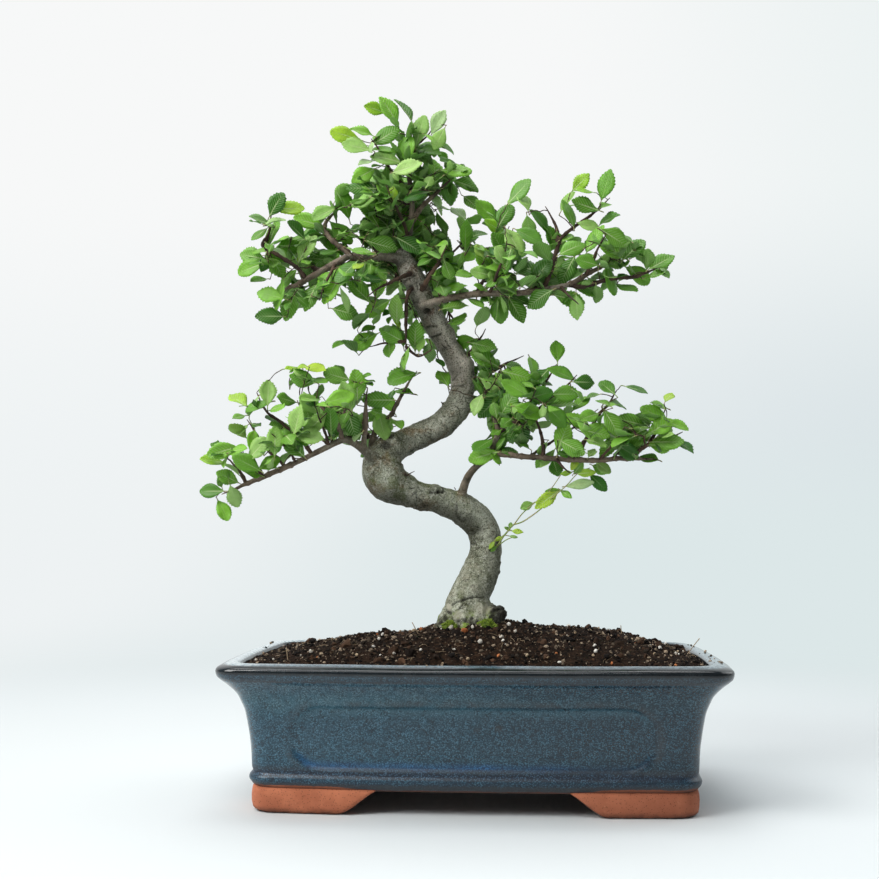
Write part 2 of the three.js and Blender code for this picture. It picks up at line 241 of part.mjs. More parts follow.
    [-43, 74.3, 333.9, 0.05, 0.71, -0.7, 0.35, 0.65, 0.68, 15.8, 8.8],
    [-40, 58.3, 343.8, -0.47, 0.64, 0.61, 0.76, -0.06, 0.65, 14.8, 8.5],
    [-20.8, 47.8, 320.6, -0.42, 0.79, 0.45, 0.28, -0.36, 0.89, 15.9, 8.2],
    [-14.7, 47.3, 336.8, -0.73, 0.52, 0.44, 0.68, 0.63, 0.39, 14.3, 7.4],
    [-32, 62.2, 323, -0.41, 0.91, 0.09, 0.08, -0.06, 0.99, 12.5, 6.3],
    [-41.2, 74.8, 346.3, 0.32, 0.83, -0.46, 0.24, 0.4, 0.88, 14.6, 8.1],
    [-37.1, 49.3, 327.8, -0.37, 0.83, 0.42, 0.9, 0.2, 0.39, 16.5, 8.9],
    [-52.1, 68.6, 334.7, -0.69, 0.72, 0.01, 0.31, 0.28, 0.91, 12.8, 6.8],
    [-41.7, 37.9, 329.7, 0.16, 0.96, -0.21, -0.25, 0.25, 0.94, 13.5, 7.2],
    [-43.8, 66.7, 324.6, -0.77, 0.63, -0.11, 0.02, 0.19, 0.98, 16.8, 9],
  ]],
  ["shoot_crown_8", [-23.4, 36, 307.7, 2.8], [-25.5, 35.2, 308.8], [
    [-23, 53.8, 303.4, -0.71, 0.7, 0.04, -0.09, -0.15, 0.99, 14, 7.7],
    [-2.6, 13.3, 294, 0.08, 1, -0.03, -0.1, 0.04, 0.99, 17.5, 9.5],
    [-35.8, 14.4, 322.9, -0.56, 0.77, 0.3, 0.73, 0.28, 0.63, 16.1, 8.9],
    [-12.7, 33, 325.2, -0.26, 0.96, 0.1, 0.07, -0.09, 0.99, 15.9, 8.4],
    [-22.8, 18.9, 293.7, -0.39, 0.91, 0.14, 0.25, -0.04, 0.97, 18.8, 10.8],
    [-32.9, 34.5, 321.6, -0.25, 0.97, 0, -0.35, -0.09, 0.93, 18.3, 9],
    [-24.3, 16.4, 319, 0.49, 0.65, 0.58, -0.85, 0.18, 0.5, 13.7, 6.7],
    [-22.5, 37.2, 294.7, 0.42, 0.91, 0.02, -0.27, 0.11, 0.96, 13.8, 7.3],
    [-41.2, 41, 296.1, 0.11, 0.96, 0.27, -0.99, 0.09, 0.1, 17.1, 8.3],
    [-34.7, 19.7, 304.4, -0.86, 0.31, -0.4, 0.12, 0.89, 0.44, 13.9, 7.4],
    [-30.9, 42.4, 310.7, 0.37, -0.92, -0.09, 0.21, -0.01, 0.98, 17.2, 8.8],
    [-16.1, 33.9, 311.4, 0.13, 0.99, 0.07, 0.08, -0.08, 0.99, 19.3, 11],
    [-34, 27, 313.9, -1, -0.05, 0, -0.02, 0.42, 0.91, 15.6, 8.4],
    [-22.6, 16.4, 306.7, -0.69, 0.72, -0.07, 0.37, 0.44, 0.82, 18.1, 8.9],
    [-26.3, 44.9, 319.1, -0.39, 0.78, -0.48, -0.41, 0.32, 0.85, 17.9, 9.2],
    [-19.6, 16.9, 296.7, 0.9, 0.44, -0.01, 0.01, 0, 1, 14.8, 7.7],
  ]],
  ["shoot_hanging_1", [-53.2, -14.8, 288, 1], [-52.8, -14.9, 287.2], [
    [-80.4, -15.6, 289, -0.65, -0.72, -0.24, 0.04, -0.36, 0.93, 16.1, 9],
    [-26, -3.7, 279.2, 0.55, -0.61, -0.57, 0.32, -0.47, 0.82, 10.8, 5.4],
    [-50.9, -10.9, 299.1, 0.02, -0.28, 0.96, -0.68, -0.71, -0.19, 22, 12.5],
    [-52.4, -13.3, 257.7, -0.32, -0.66, -0.68, -0.54, -0.46, 0.7, 10.7, 6.2],
    [-42.1, -19.6, 284.5, -0.22, -0.31, -0.92, -0.75, -0.55, 0.36, 17, 9.5],
    [-66.5, -32, 304.5, -0.7, 0.64, -0.32, -0.16, 0.3, 0.94, 17.9, 10.5],
    [-39.4, -7.4, 283, 0.02, -0.28, 0.96, -0.37, -0.89, -0.25, 22, 11.9],
    [-56, -10.9, 290.6, 0.04, -0.58, -0.82, -0.56, -0.69, 0.46, 15.3, 8.8],
    [-62.7, -14.6, 294.4, -0.84, -0.21, -0.5, 0.16, -0.98, 0.14, 21.9, 10.8],
    [-37.1, -11.2, 268.5, -0.93, -0.24, -0.27, 0.08, -0.87, 0.49, 21.9, 12.7],
    [-55.1, 1.2, 310, -0.15, -0.64, -0.75, -0.66, -0.51, 0.56, 11, 5.6],
    [-29.3, -20.2, 287.9, -0.04, 0.63, -0.78, 0.41, 0.72, 0.56, 16.4, 9.2],
    [-66.2, -13.9, 300.1, 0.41, -0.71, 0.57, -0.59, 0.26, 0.76, 10.8, 6.2],
    [-41.7, -3.5, 312.2, 0.04, -0.63, -0.78, -0.91, -0.35, 0.23, 16.3, 9.6],
    [-39.5, -8, 255, -0.96, 0.11, 0.27, 0.17, -0.55, 0.82, 16.4, 9.7],
    [-46.9, -7.7, 285.8, -0.26, 0.1, 0.96, 0.84, -0.47, 0.28, 19.1, 11.1],
  ]],
  ["shoot_left_back_1", [-99.2, 50.7, 249.1, 1.6], [-97.1, 52, 248.6], [
    [-117.9, 60.1, 257.1, -0.48, 0.78, 0.4, 0.64, -0, 0.77, 19.3, 11],
    [-96.9, 29.1, 228.2, -0.21, 0.86, 0.46, -0.27, -0.5, 0.82, 17.3, 8.8],
    [-80.1, 49.3, 262.5, 0.38, 0.84, -0.39, 0.14, 0.36, 0.92, 17.3, 9.4],
    [-104.3, 62.6, 245.6, 0.33, 0.94, -0.05, 0.11, 0.01, 0.99, 15.4, 8.7],
    [-101, 36.6, 252.2, -0.41, 0.87, 0.28, 0.15, -0.24, 0.96, 15.9, 9.3],
    [-91.4, 50.3, 234.6, 0.65, 0.73, 0.22, -0.69, 0.44, 0.57, 16.1, 9.5],
    [-112, 51.3, 247.2, -0.69, 0.72, 0.05, 0.41, 0.33, 0.85, 14.6, 8.2],
    [-92.6, 45.7, 269.3, -0.15, 0.79, -0.6, 0.1, 0.62, 0.78, 19.2, 10.6],
    [-92.6, 34.1, 245.5, 0.33, 0.93, -0.15, -0.09, 0.19, 0.98, 19.4, 10.1],
    [-95.1, 50.5, 240, -0.91, 0.12, 0.39, 0.37, 0.65, 0.66, 17, 8.5],
    [-108.5, 55.3, 251.5, 0.76, -0.15, 0.63, -0.24, 0.83, 0.5, 15.9, 8.7],
    [-80.6, 48.2, 247.1, 0.23, 0.95, 0.19, 0.05, -0.21, 0.98, 14.4, 7.5],
    [-92.5, 27.4, 252.2, -0.25, 0.9, -0.34, 0.16, 0.39, 0.91, 14.9, 7.5],
    [-96.4, 57.6, 256.7, -0.48, 0.85, -0.24, -0.04, 0.25, 0.97, 18.7, 9.1],
    [-96.7, 49.3, 235.9, -0.21, 0.98, 0, 0.29, 0.06, 0.95, 18.5, 10.6],
    [-106, 31, 245.9, 0.48, 0.87, 0.07, 0.06, -0.11, 0.99, 13.3, 7.1],
  ]],
  ["shoot_left_back_2", [-75.1, 22.8, 229.8, 2.7], [-78.1, 20.8, 230.9], [
    [-108, -2.2, 225.3, -0.36, 0.85, 0.38, 0.66, -0.06, 0.75, 19.1, 10.1],
    [-56.8, 20.7, 221.1, -0.12, 0.99, -0.1, -0.01, 0.1, 0.99, 19, 10.5],
    [-87.4, 27.8, 232.9, -0.35, 0.83, 0.44, 0.54, -0.21, 0.81, 19.1, 10.8],
    [-79.1, -3.4, 234.2, -0.6, 0.8, -0.04, -0.24, -0.13, 0.96, 15.8, 8],
    [-52.9, 12.2, 237.5, -0.94, 0.06, 0.34, 0.34, 0.23, 0.91, 17.8, 8.8],
    [-69.5, 4, 227.8, 0.34, 0.3, -0.89, 0.58, 0.68, 0.45, 19, 11.1],
    [-69.7, 22.6, 247.6, -0.22, 0.95, -0.23, -0.13, 0.2, 0.97, 15.3, 8.4],
    [-81.4, 16.5, 223.7, 0.17, 0.98, 0.04, 0.21, -0.07, 0.97, 17.4, 9.9],
    [-81.5, 40, 235, 0.98, 0.19, -0.04, 0.01, 0.16, 0.99, 16.4, 9.8],
    [-88, 13.2, 231.4, -0.41, 0.8, 0.43, 0.55, -0.16, 0.82, 13.7, 7.1],
    [-106.3, 5.8, 241, -0.41, 0.91, 0.09, 0.12, -0.04, 0.99, 17.6, 9.5],
    [-100.9, 21.3, 227.5, 0.29, 0.96, -0.04, 0.16, -0, 0.99, 16.8, 9.2],
    [-74.2, 7.4, 232, -0.12, 0.99, -0.05, 0.36, 0.09, 0.93, 15.4, 8.6],
    [-54.2, 12.1, 219.5, -0.74, 0.64, -0.2, -0.01, 0.28, 0.96, 13.3, 6.5],
    [-77.9, 16.7, 240.1, -0.43, 0.9, 0, -0.06, -0.03, 1, 15, 7.3],
    [-64.1, 14.4, 230.5, 0.44, 0.89, 0.1, -0.24, 0.01, 0.97, 15.1, 8.9],
  ]],
  ["shoot_left_lower_1", [-95.9, -62, 240.9, 0.8], [-96.7, -50.3, 251.8], [
    [-83.5, -43.7, 239.1, 0.23, -0.61, -0.75, 0.75, -0.39, 0.54, 12.9, 7],
    [-117.7, -51.8, 265.8, 0.65, 0.72, 0.24, 0.15, -0.44, 0.89, 10.4, 5.8],
    [-82.9, -27.4, 266.2, -0.46, -0.76, 0.45, 0.21, 0.4, 0.89, 10.6, 6],
    [-86, -76.9, 239.6, -0.74, 0.62, 0.24, -0.14, -0.5, 0.86, 9.9, 5],
    [-97.6, -34.2, 250, -0.83, 0.44, -0.34, 0.06, 0.69, 0.72, 13.6, 8.1],
    [-110.6, -44.3, 245.8, -0.65, -0.75, 0.13, 0.71, -0.54, 0.45, 15.5, 8.9],
    [-102.9, -41.2, 260.1, 0.77, -0.64, -0.06, -0.27, -0.4, 0.87, 15.5, 7.9],
    [-93.7, -55.5, 237.2, -0.68, -0.3, 0.67, 0.3, -0.95, -0.12, 17.9, 10.6],
    [-74.3, -56.3, 238.3, -0.24, -0.29, 0.93, 0.25, -0.94, -0.23, 20.6, 10.2],
    [-77.8, -38.5, 260.6, -0.91, -0.33, 0.23, 0.34, -0.94, -0.01, 18.5, 10.9],
    [-97, -52.7, 257, -0.93, -0.28, 0.24, 0.29, -0.96, 0, 18, 10.7],
    [-107, -37.4, 268.8, 0.77, -0.64, -0.06, -0.38, -0.53, 0.76, 18.2, 8.7],
    [-107.3, -44.6, 247.1, 0.45, -0.27, -0.85, 0.66, -0.54, 0.52, 15.6, 7.6],
    [-114, -46.9, 255.7, 0.41, -0.71, 0.57, -0.49, 0.35, 0.8, 10.3, 4.8],
    [-101.5, -58.2, 266.5, -0.77, 0.64, 0.06, -0.24, -0.37, 0.9, 18, 10.2],
    [-99.8, -30.4, 248.3, 0.24, -0.73, 0.64, -0.68, 0.35, 0.65, 15.7, 7.5],
  ]],
  ["shoot_left_lower_2", [-85.4, -18.9, 231.2, 1.6], [-83.8, -22.8, 238.6], [
    [-112.1, 1.6, 238.2, -0.63, 0.27, 0.72, 0.6, -0.42, 0.68, 13.1, 7.7],
    [-53.8, -14, 238.2, 0.55, -0.61, -0.57, 0.26, -0.52, 0.81, 13.3, 7.5],
    [-95.6, -37, 230.5, 0.74, -0.62, -0.24, -0.04, -0.41, 0.91, 15.6, 7.5],
    [-73.1, -28.7, 263.2, 0.74, -0.65, 0.13, -0.58, -0.54, 0.62, 10.5, 5],
    [-88.1, -13.7, 225.5, -0.04, 0.95, 0.31, 0.33, -0.28, 0.9, 16.9, 9.7],
    [-104.2, -29.7, 251.5, -0.12, 0.91, -0.39, 0.41, 0.41, 0.82, 14.3, 6.9],
    [-71.3, -19.9, 242, -0.15, -0.64, -0.75, -0.69, -0.48, 0.54, 10.6, 5.7],
    [-87, -12.8, 251.3, -0.47, 0.85, -0.25, -0.22, 0.16, 0.96, 13.2, 6.9],
    [-69.6, -39.1, 227.6, -0.47, -0.68, -0.57, -0.31, -0.47, 0.82, 10.3, 5.7],
    [-102.5, -35, 224.2, -0.13, 0.99, -0.04, -0.07, 0.03, 1, 16.7, 8.9],
    [-52.1, -11.1, 241.9, -0.5, 0.09, 0.86, 0.09, -0.98, 0.16, 16.3, 8.1],
    [-111.6, -16.6, 231.4, -0.17, 0.94, -0.29, -0.4, 0.2, 0.89, 14.8, 8.1],
    [-52, -21, 249.6, -0.97, -0.26, -0.02, 0.26, -0.96, 0.06, 21.6, 10.7],
    [-83.6, -35.2, 229.2, 0.58, 0.76, -0.3, 0.03, 0.35, 0.93, 10.5, 5.2],
    [-92.2, -26.5, 237.2, -0.31, 0.94, 0.16, -0.12, -0.2, 0.97, 15, 7.2],
    [-106.4, -23.9, 241.3, -0.66, 0, -0.75, -0.03, 1, 0.03, 13.1, 6.5],
  ]],
  ["shoot_left_lower_3", [-128.7, -44, 239.4, 0.8], [-133, -40.2, 234.4], [
    [-115.4, -19.8, 233.8, -0.45, 0.79, 0.41, 0.59, -0.08, 0.8, 16.4, 8.9],
    [-136.5, -47.8, 228.3, 0.04, -0.63, -0.78, 0.43, -0.69, 0.58, 15.4, 7.2],
    [-127.6, -51, 242.9, -0.01, 0.11, 0.99, 0.2, -0.97, 0.11, 18.1, 10.8],
    [-145.3, -33.4, 239, -0.65, -0.72, -0.24, 0.28, -0.53, 0.8, 10.5, 5.8],
    [-122.3, -34.3, 234.6, -0.65, -0.75, 0.13, 0.59, -0.39, 0.71, 13.1, 7.4],
    [-138.3, -26.7, 221.1, 0.63, -0.76, 0.14, 0.05, 0.22, 0.97, 15.6, 8.5],
    [-126.8, -49, 240.4, 0.74, -0.65, 0.13, -0.56, -0.51, 0.65, 15.4, 7.8],
    [-141, -48.4, 242.8, -0.74, 0.49, 0.46, 0.17, -0.52, 0.84, 18.8, 11],
    [-111.9, -35.6, 228.6, -0.28, 0.63, 0.72, 0.96, 0.2, 0.2, 18.7, 11],
    [-143.7, -36.6, 224.1, -0.51, -0.71, 0.5, -0.18, 0.65, 0.74, 17, 8.6],
    [-139.7, -42.8, 232.9, 0.74, -0.62, -0.24, -0.15, -0.51, 0.85, 10.4, 5.1],
    [-131.3, -38.3, 220, 0.72, -0.69, -0.02, -0.37, -0.41, 0.83, 13.9, 7.4],
    [-134.7, -44.1, 250.1, -0.32, -0.66, -0.68, -0.43, -0.54, 0.72, 10.4, 6.1],
    [-141.5, -39.9, 238, 0.24, -0.73, 0.64, -0.5, 0.47, 0.72, 10.4, 5.8],
    [-114.3, -13.3, 228.5, -0.99, 0.14, -0.03, 0.05, 0.5, 0.87, 16.7, 9.3],
    [-125.4, -47.9, 246.2, -0.93, -0.24, -0.27, -0, -0.75, 0.67, 18.1, 10.2],
  ]],
  ["shoot_left_lower_4", [-115.8, -54.8, 217.3, 0.9], [-113.2, -53.2, 221], [
    [-125.9, -67.6, 211.8, 0.27, -0.93, 0.25, -0.46, 0.1, 0.88, 16.2, 8.6],
    [-104.2, -36, 224.6, -0.88, 0.45, -0.18, 0.05, 0.45, 0.89, 14.5, 8.4],
    [-108.6, -57.4, 223.6, 0.94, -0.35, -0.03, -0.27, -0.79, 0.55, 19.1, 11],
    [-121.1, -50.6, 204.3, -0.77, 0.64, 0.06, -0.36, -0.5, 0.79, 10.3, 5.3],
    [-138.8, -57.1, 208.6, 0.71, -0.21, 0.67, -0.39, -0.91, 0.13, 20.6, 11.4],
    [-113.5, -38.2, 226.5, -0.67, -0.64, 0.36, 0.69, -0.38, 0.61, 18.6, 10.1],
    [-104, -49.6, 210.8, -0.68, -0.3, 0.67, 0.41, -0.91, 0, 20.8, 10.7],
    [-120.1, -64.4, 210.5, -0.01, 0.11, 0.99, 0.2, -0.97, 0.11, 20.5, 10.2],
    [-108.6, -62.3, 223.8, 0.27, -0.26, 0.93, -0.41, -0.9, -0.13, 20.5, 11.2],
    [-90, -52.8, 238.5, -0.68, -0.18, -0.71, 0.04, -0.98, 0.21, 20.7, 10.4],
    [-119.4, -40.6, 207.9, 0.41, -0.71, 0.57, -0.5, 0.34, 0.79, 12.9, 7.7],
    [-131, -43.1, 217.2, 0.56, -0.82, -0.11, -0.04, -0.15, 0.99, 17.4, 10.3],
    [-105.5, -45.6, 228.5, 0.22, -0.75, -0.62, 0.26, -0.57, 0.78, 12.8, 6.2],
    [-100.7, -52.5, 219, -0.68, -0.73, -0.06, 0.45, -0.47, 0.76, 10.2, 4.9],
    [-109.8, -48.2, 221.3, -0.21, 0.81, 0.55, 0.56, -0.36, 0.74, 16.2, 9.4],
    [-114.9, -56.2, 223.9, 0.33, -0.92, -0.21, -0.49, -0.36, 0.8, 18.8, 9.1],
  ]],
  ["shoot_left_lower_5", [-149.2, -36, 204.7, 1], [-151.7, -44.1, 203.6], [
    [-160.5, -42.6, 185.4, 0.5, -0.09, -0.86, 0.24, -0.94, 0.24, 15.6, 8.1],
    [-164.7, -38.6, 216.6, 0.41, -0.71, 0.57, -0.49, 0.35, 0.8, 10.4, 4.9],
    [-130, -57.1, 202.1, -0.83, -0.29, 0.47, 0.4, -0.9, 0.15, 20.6, 10.9],
    [-136.4, -37.9, 213, -0.53, 0.85, 0.01, -0.31, -0.2, 0.93, 18.3, 10.2],
    [-148.5, -36.4, 195.9, -0.71, -0.59, 0.39, 0.56, -0.81, -0.2, 17.8, 9.3],
    [-132.3, -42.9, 199.8, -0.65, -0.75, 0.13, 0.66, -0.48, 0.57, 15.4, 8.5],
    [-154.9, -46.4, 190.3, -0.99, 0.13, 0.02, -0.13, -0.98, 0.13, 18.2, 9.1],
    [-151.2, -51.8, 214, 0.83, -0.54, 0.16, -0.53, -0.65, 0.55, 15.8, 9.4],
    [-154.2, -43.5, 213, -0.15, -0.64, -0.75, -0.68, -0.49, 0.55, 10.3, 5.5],
    [-151.2, -48.8, 194.4, 0.2, 0.51, -0.84, -0.03, 0.86, 0.51, 16.9, 9.3],
    [-153.9, -40.9, 207.3, -0.86, -0.47, 0.2, 0.46, -0.51, 0.73, 19.5, 10.4],
    [-148.6, -34.7, 200.8, -0.59, -0.56, 0.58, 0.37, 0.45, 0.81, 15, 7.1],
    [-146.9, -45.4, 218.1, -0.93, -0.24, -0.27, 0.22, -0.97, 0.1, 21, 10.4],
    [-158.6, -38.5, 192.8, 0.05, -0.75, 0.66, -0.89, 0.27, 0.37, 10.4, 6.1],
    [-140.1, -36.2, 206.4, -0.68, 0.73, 0.09, -0.06, -0.18, 0.98, 16.2, 8.8],
  ]],
  ["shoot_left_upper_1", [-95.8, 5.1, 337.5, 1.2], [-101.4, 7.4, 354.2], [
    [-94.8, 30, 369.8, 0.28, 0.93, 0.26, -0.72, 0.02, 0.69, 13.3, 7.8],
    [-99.8, -8.1, 323.4, -0.27, 0.96, 0.1, 0.36, 0, 0.93, 15.1, 8.8],
    [-91.3, -11.5, 379.4, -0.84, -0.21, -0.5, -0.06, -0.88, 0.47, 19.2, 11],
    [-131.9, 8.7, 346, 0.55, 0.67, 0.49, -0.82, 0.32, 0.48, 16.9, 10],
    [-72.3, 4.7, 352.7, -0.62, 0.78, -0.03, 0.25, 0.23, 0.94, 18.7, 11.2],
    [-100.1, 21.3, 339.3, -0.44, 0.87, -0.23, 0.14, 0.32, 0.94, 18.8, 9.7],
    [-97.6, 12.8, 359.6, -0.58, -0.76, 0.3, 0.06, 0.33, 0.94, 11.2, 5.9],
    [-88, -17.2, 349.8, -0.03, 0.9, 0.44, -0.38, -0.42, 0.82, 17.6, 9.2],
    [-107.6, 3.6, 339.8, -0.83, -0.29, 0.47, 0.5, -0.76, 0.42, 22.6, 11.6],
    [-125.6, 14.8, 366.3, 0.17, 0.95, 0.27, -0.32, -0.21, 0.92, 16.5, 8.8],
    [-97.4, 4.2, 333.8, -0.04, 0.82, 0.57, 0.07, -0.56, 0.82, 17.1, 9.5],
    [-101.1, 35.7, 353.5, -0.42, 0.67, 0.61, 0.15, -0.61, 0.77, 13.3, 7.9],
    [-119, 0.1, 361.4, 0.36, 0.88, 0.3, -0.51, -0.09, 0.86, 14.3, 8.2],
    [-99.8, -9.3, 367, -0.93, -0.28, 0.24, 0.34, -0.89, 0.29, 22.3, 12.1],
    [-97.8, -13.8, 365.2, 0.46, 0.76, -0.45, 0.3, 0.34, 0.89, 11, 5.8],
    [-105, 14.1, 342.3, -0.8, 0.51, 0.3, 0.36, 0.03, 0.93, 18.6, 9.1],
  ]],
  ["shoot_left_upper_2", [-121.7, -31, 340.3, 1.3], [-122.5, -23.9, 340.5], [
    [-132.1, -31.7, 368.2, 0.51, -0.23, 0.83, -0.16, -0.97, -0.18, 18.8, 11.1],
    [-122.3, -29, 303.4, -0.92, -0.38, -0.03, 0.38, -0.92, 0.06, 19.3, 11.1],
    [-104.6, -18.2, 335.1, 0.32, 0.66, 0.68, -0.55, -0.46, 0.7, 10.9, 6.4],
    [-133.6, -38, 338.9, -0.96, 0.11, 0.27, -0.09, -0.99, 0.1, 18.6, 11.1],
    [-128.3, -9.7, 344.4, -0.74, 0.53, 0.42, 0.64, 0.35, 0.69, 15.7, 8.5],
    [-126.6, -11.3, 320.1, 0.67, 0.73, -0.15, -0.39, 0.52, 0.76, 18.6, 10.6],
    [-120.5, -14.8, 357.1, 0.77, -0.64, -0.06, -0.36, -0.51, 0.78, 10.9, 5.5],
    [-115.1, -22.4, 335.9, -0.71, 0.24, -0.67, -0.45, -0.88, 0.15, 16.4, 9.3],
    [-132.9, -29.7, 348.7, 0.25, 0.13, 0.96, -0.65, -0.72, 0.27, 21.8, 13],
    [-134.2, -25.3, 328.9, -0.65, -0.72, -0.24, 0.29, -0.54, 0.79, 13.4, 7.2],
    [-121.9, -33.1, 326.7, -0.25, -0.13, -0.96, -0.56, -0.79, 0.25, 21.6, 11.4],
    [-131.4, -45.8, 359.4, 0.61, 0.67, 0.43, -0.11, -0.46, 0.88, 17.8, 10.6],
    [-114.6, -22.7, 339.9, 0.51, -0.23, 0.83, -0.45, -0.89, 0.02, 21.9, 12.2],
    [-133.1, -36.9, 349.9, 0.55, -0.61, -0.57, 0.2, -0.57, 0.8, 10.6, 5.4],
    [-133.9, -28.1, 347.2, 0.47, 0.3, -0.83, 0.49, -0.87, -0.03, 21.9, 11.7],
    [-101.4, -24.3, 330, -0.56, 0.69, -0.45, -0.38, 0.27, 0.88, 10.8, 6.2],
  ]],
  ["shoot_left_upper_3", [-63, -11.5, 348, 1.9], [-65.7, -1.6, 333.5], [
    [-85.9, 8.4, 334.2, 0.06, 0.99, -0.12, 0.03, 0.12, 0.99, 15.2, 8.5],
    [-48.5, -17.8, 327.1, -0.05, 0.75, -0.66, 0.85, 0.38, 0.37, 10.8, 6.4],
    [-69.6, -22.7, 353.5, 0.93, 0.28, -0.24, 0.35, -0.86, 0.38, 21.9, 12.5],
    [-78.2, -21.5, 325.5, -0.15, 0.99, 0, -0.15, -0.03, 0.99, 15.9, 9],
    [-61.8, 3.8, 351.6, -0.39, 0.92, 0.04, 0.3, 0.09, 0.95, 16.9, 8.9],
    [-49.4, 5, 332.2, -0.82, 0.37, -0.43, -0.47, -0.87, 0.14, 15.3, 7.9],
    [-54.9, -11.2, 317.3, -0.86, 0.18, -0.47, -0.3, -0.94, 0.18, 22.1, 11.9],
    [-75.8, -10.6, 346.7, 0.18, 0.84, -0.51, -0.24, 0.54, 0.81, 19.5, 10.3],
    [-60.9, -15, 340.6, -0.84, -0.21, -0.5, -0.01, -0.92, 0.4, 22, 12],
    [-67.2, -0.7, 312.8, -0.17, 0.85, 0.49, 0.82, -0.15, 0.56, 17.4, 9.4],
    [-52.6, -2.4, 336.7, -0.55, 0.61, 0.57, 0.17, -0.58, 0.79, 16.6, 8.3],
    [-65.2, -9, 317.2, 0.27, -0.26, 0.93, -0.52, -0.85, -0.08, 22.1, 13],
    [-47.2, -8.7, 323.2, -0.41, 0.71, -0.57, -0.32, 0.47, 0.82, 16.5, 9.3],
    [-74.3, 2.7, 342.4, -0.5, 0.86, 0.1, 0.44, 0.15, 0.89, 14.5, 7.2],
    [-53.4, -0.6, 311.5, -0.65, -0.72, -0.24, 0.21, -0.48, 0.85, 10.9, 5.5],
    [-77.8, 7.6, 347.8, 0.96, -0.11, -0.27, 0.14, -0.62, 0.77, 19.6, 10],
  ]],
  ["shoot_left_upper_4", [-92.2, -35.2, 328, 1.2], [-82.7, -36.4, 326.5], [
    [-92.3, -20.4, 323, -0.38, 0.92, -0.04, -0.3, -0.08, 0.95, 17.9, 8.9],
    [-60.8, -49.6, 338.4, -0.68, -0.73, -0.06, 0.37, -0.41, 0.84, 10.3, 6],
    [-99.6, -52, 313.5, 0.7, -0.53, 0.47, -0.63, -0.17, 0.76, 13.9, 7.4],
    [-88.7, -21.1, 358.1, 0.58, -0.76, -0.29, 0.47, 0.03, 0.88, 13.9, 7.5],
    [-66.6, -24.5, 312.3, -0.68, -0.3, 0.67, 0.57, -0.79, 0.22, 21.7, 12.9],
    [-88.3, -32.8, 332.7, -0.71, 0.21, -0.67, -0.42, -0.89, 0.16, 18.7, 10.6],
    [-91.6, -27.8, 308.4, 0.96, -0.11, -0.27, -0.09, -0.99, 0.1, 18.7, 11.1],
    [-54.8, -31.5, 330.3, -0.43, -0.9, -0.12, 0.69, -0.41, 0.61, 14.1, 7.4],
    [-79.2, -37.5, 325.1, -0.47, -0.68, -0.57, -0.29, -0.49, 0.82, 10.5, 5.5],
    [-100.4, -26.4, 326.1, -0.48, -0.16, -0.86, -0.27, -0.91, 0.32, 21.7, 12.1],
    [-87.7, -24.9, 338.4, -0.83, 0.54, 0.12, 0.4, 0.42, 0.81, 14.4, 8.2],
    [-70.5, -41.6, 323.8, 0.45, -0.89, 0.03, 0.48, 0.28, 0.83, 12.7, 6.7],
    [-78.1, -58.7, 340.5, 0.65, 0.75, -0.13, 0.61, -0.41, 0.68, 10.3, 5.5],
    [-67.4, -50.8, 332.5, -0.58, -0.7, -0.42, -0.12, -0.44, 0.89, 10.3, 6.1],
    [-84.5, -40.1, 320.1, 0.21, 0.46, -0.86, 0.77, 0.47, 0.44, 19.5, 11.1],
    [-73.8, -34.9, 337.7, -0.68, -0.18, -0.71, -0.12, -0.93, 0.36, 21.4, 11.7],
  ]],
  ["shoot_right_lower_1", [5.6, -1, 260.8, 0.9], [9.3, -1.2, 264.5], [
    [-0.4, 6.8, 293.5, -0.93, 0.31, -0.21, -0.31, -0.95, -0.03, 15, 8.5],
    [15.9, -13.1, 238.8, 0.51, -0.23, 0.83, -0.46, -0.89, 0.03, 21.7, 12.2],
    [-17.7, -5.7, 259.9, -0.45, 0.44, 0.78, 0.23, -0.78, 0.58, 16.3, 9.5],
    [6.2, 0.8, 252.8, -0.01, 0.11, 0.99, 0.2, -0.97, 0.11, 22.2, 11],
    [17.4, -8.1, 269.7, 0.96, -0.11, -0.27, -0.09, -0.99, 0.1, 21.9, 10.8],
    [10.4, -1.4, 279.4, 0.32, 0.66, 0.68, -0.45, -0.53, 0.72, 10.9, 5.3],
    [8.7, -4.6, 241.2, 0.14, 0.76, -0.64, 0.71, 0.37, 0.6, 10.9, 6.1],
    [5.7, -9.1, 255.4, -0.43, -0.39, -0.82, -0.24, -0.82, 0.52, 17.6, 9.5],
    [3.5, 11.6, 269.8, -0.14, -0.76, 0.64, 0.72, 0.37, 0.59, 11, 6.3],
    [12.5, -3.1, 269.7, 0.55, -0.61, -0.57, 0.12, -0.62, 0.78, 10.8, 5.1],
    [21.3, 4.9, 250.7, -0.53, 0.03, 0.85, 0.77, -0.39, 0.5, 12.8, 6.4],
    [17.7, -20, 266.4, 0.46, 0.76, -0.45, 0.26, 0.37, 0.89, 10.7, 5.3],
    [7.1, -0.2, 249.9, -0.16, 0.98, -0.15, -0.02, 0.15, 0.99, 13.9, 7.7],
    [-3.5, -1.2, 289.7, 0.96, -0.11, -0.27, 0.03, -0.88, 0.47, 19.1, 10.9],
    [9.5, 11.3, 278.1, -0.44, 0.65, 0.62, 0.68, -0.22, 0.7, 12.7, 6.8],
    [7, -18.6, 251.2, 0.65, 0.72, 0.24, 0.18, -0.46, 0.87, 10.7, 5.6],
  ]],
  ["shoot_right_lower_2", [48.4, -20.3, 248.4, 1.1], [45.8, -21.4, 250.1], [
    [53.4, -13.1, 274.5, -0.02, 0.27, 0.96, 0.2, -0.94, 0.27, 17, 9.6],
    [25.5, -42.5, 242.4, 0.93, 0.28, -0.24, 0.34, -0.9, 0.28, 20.9, 11.3],
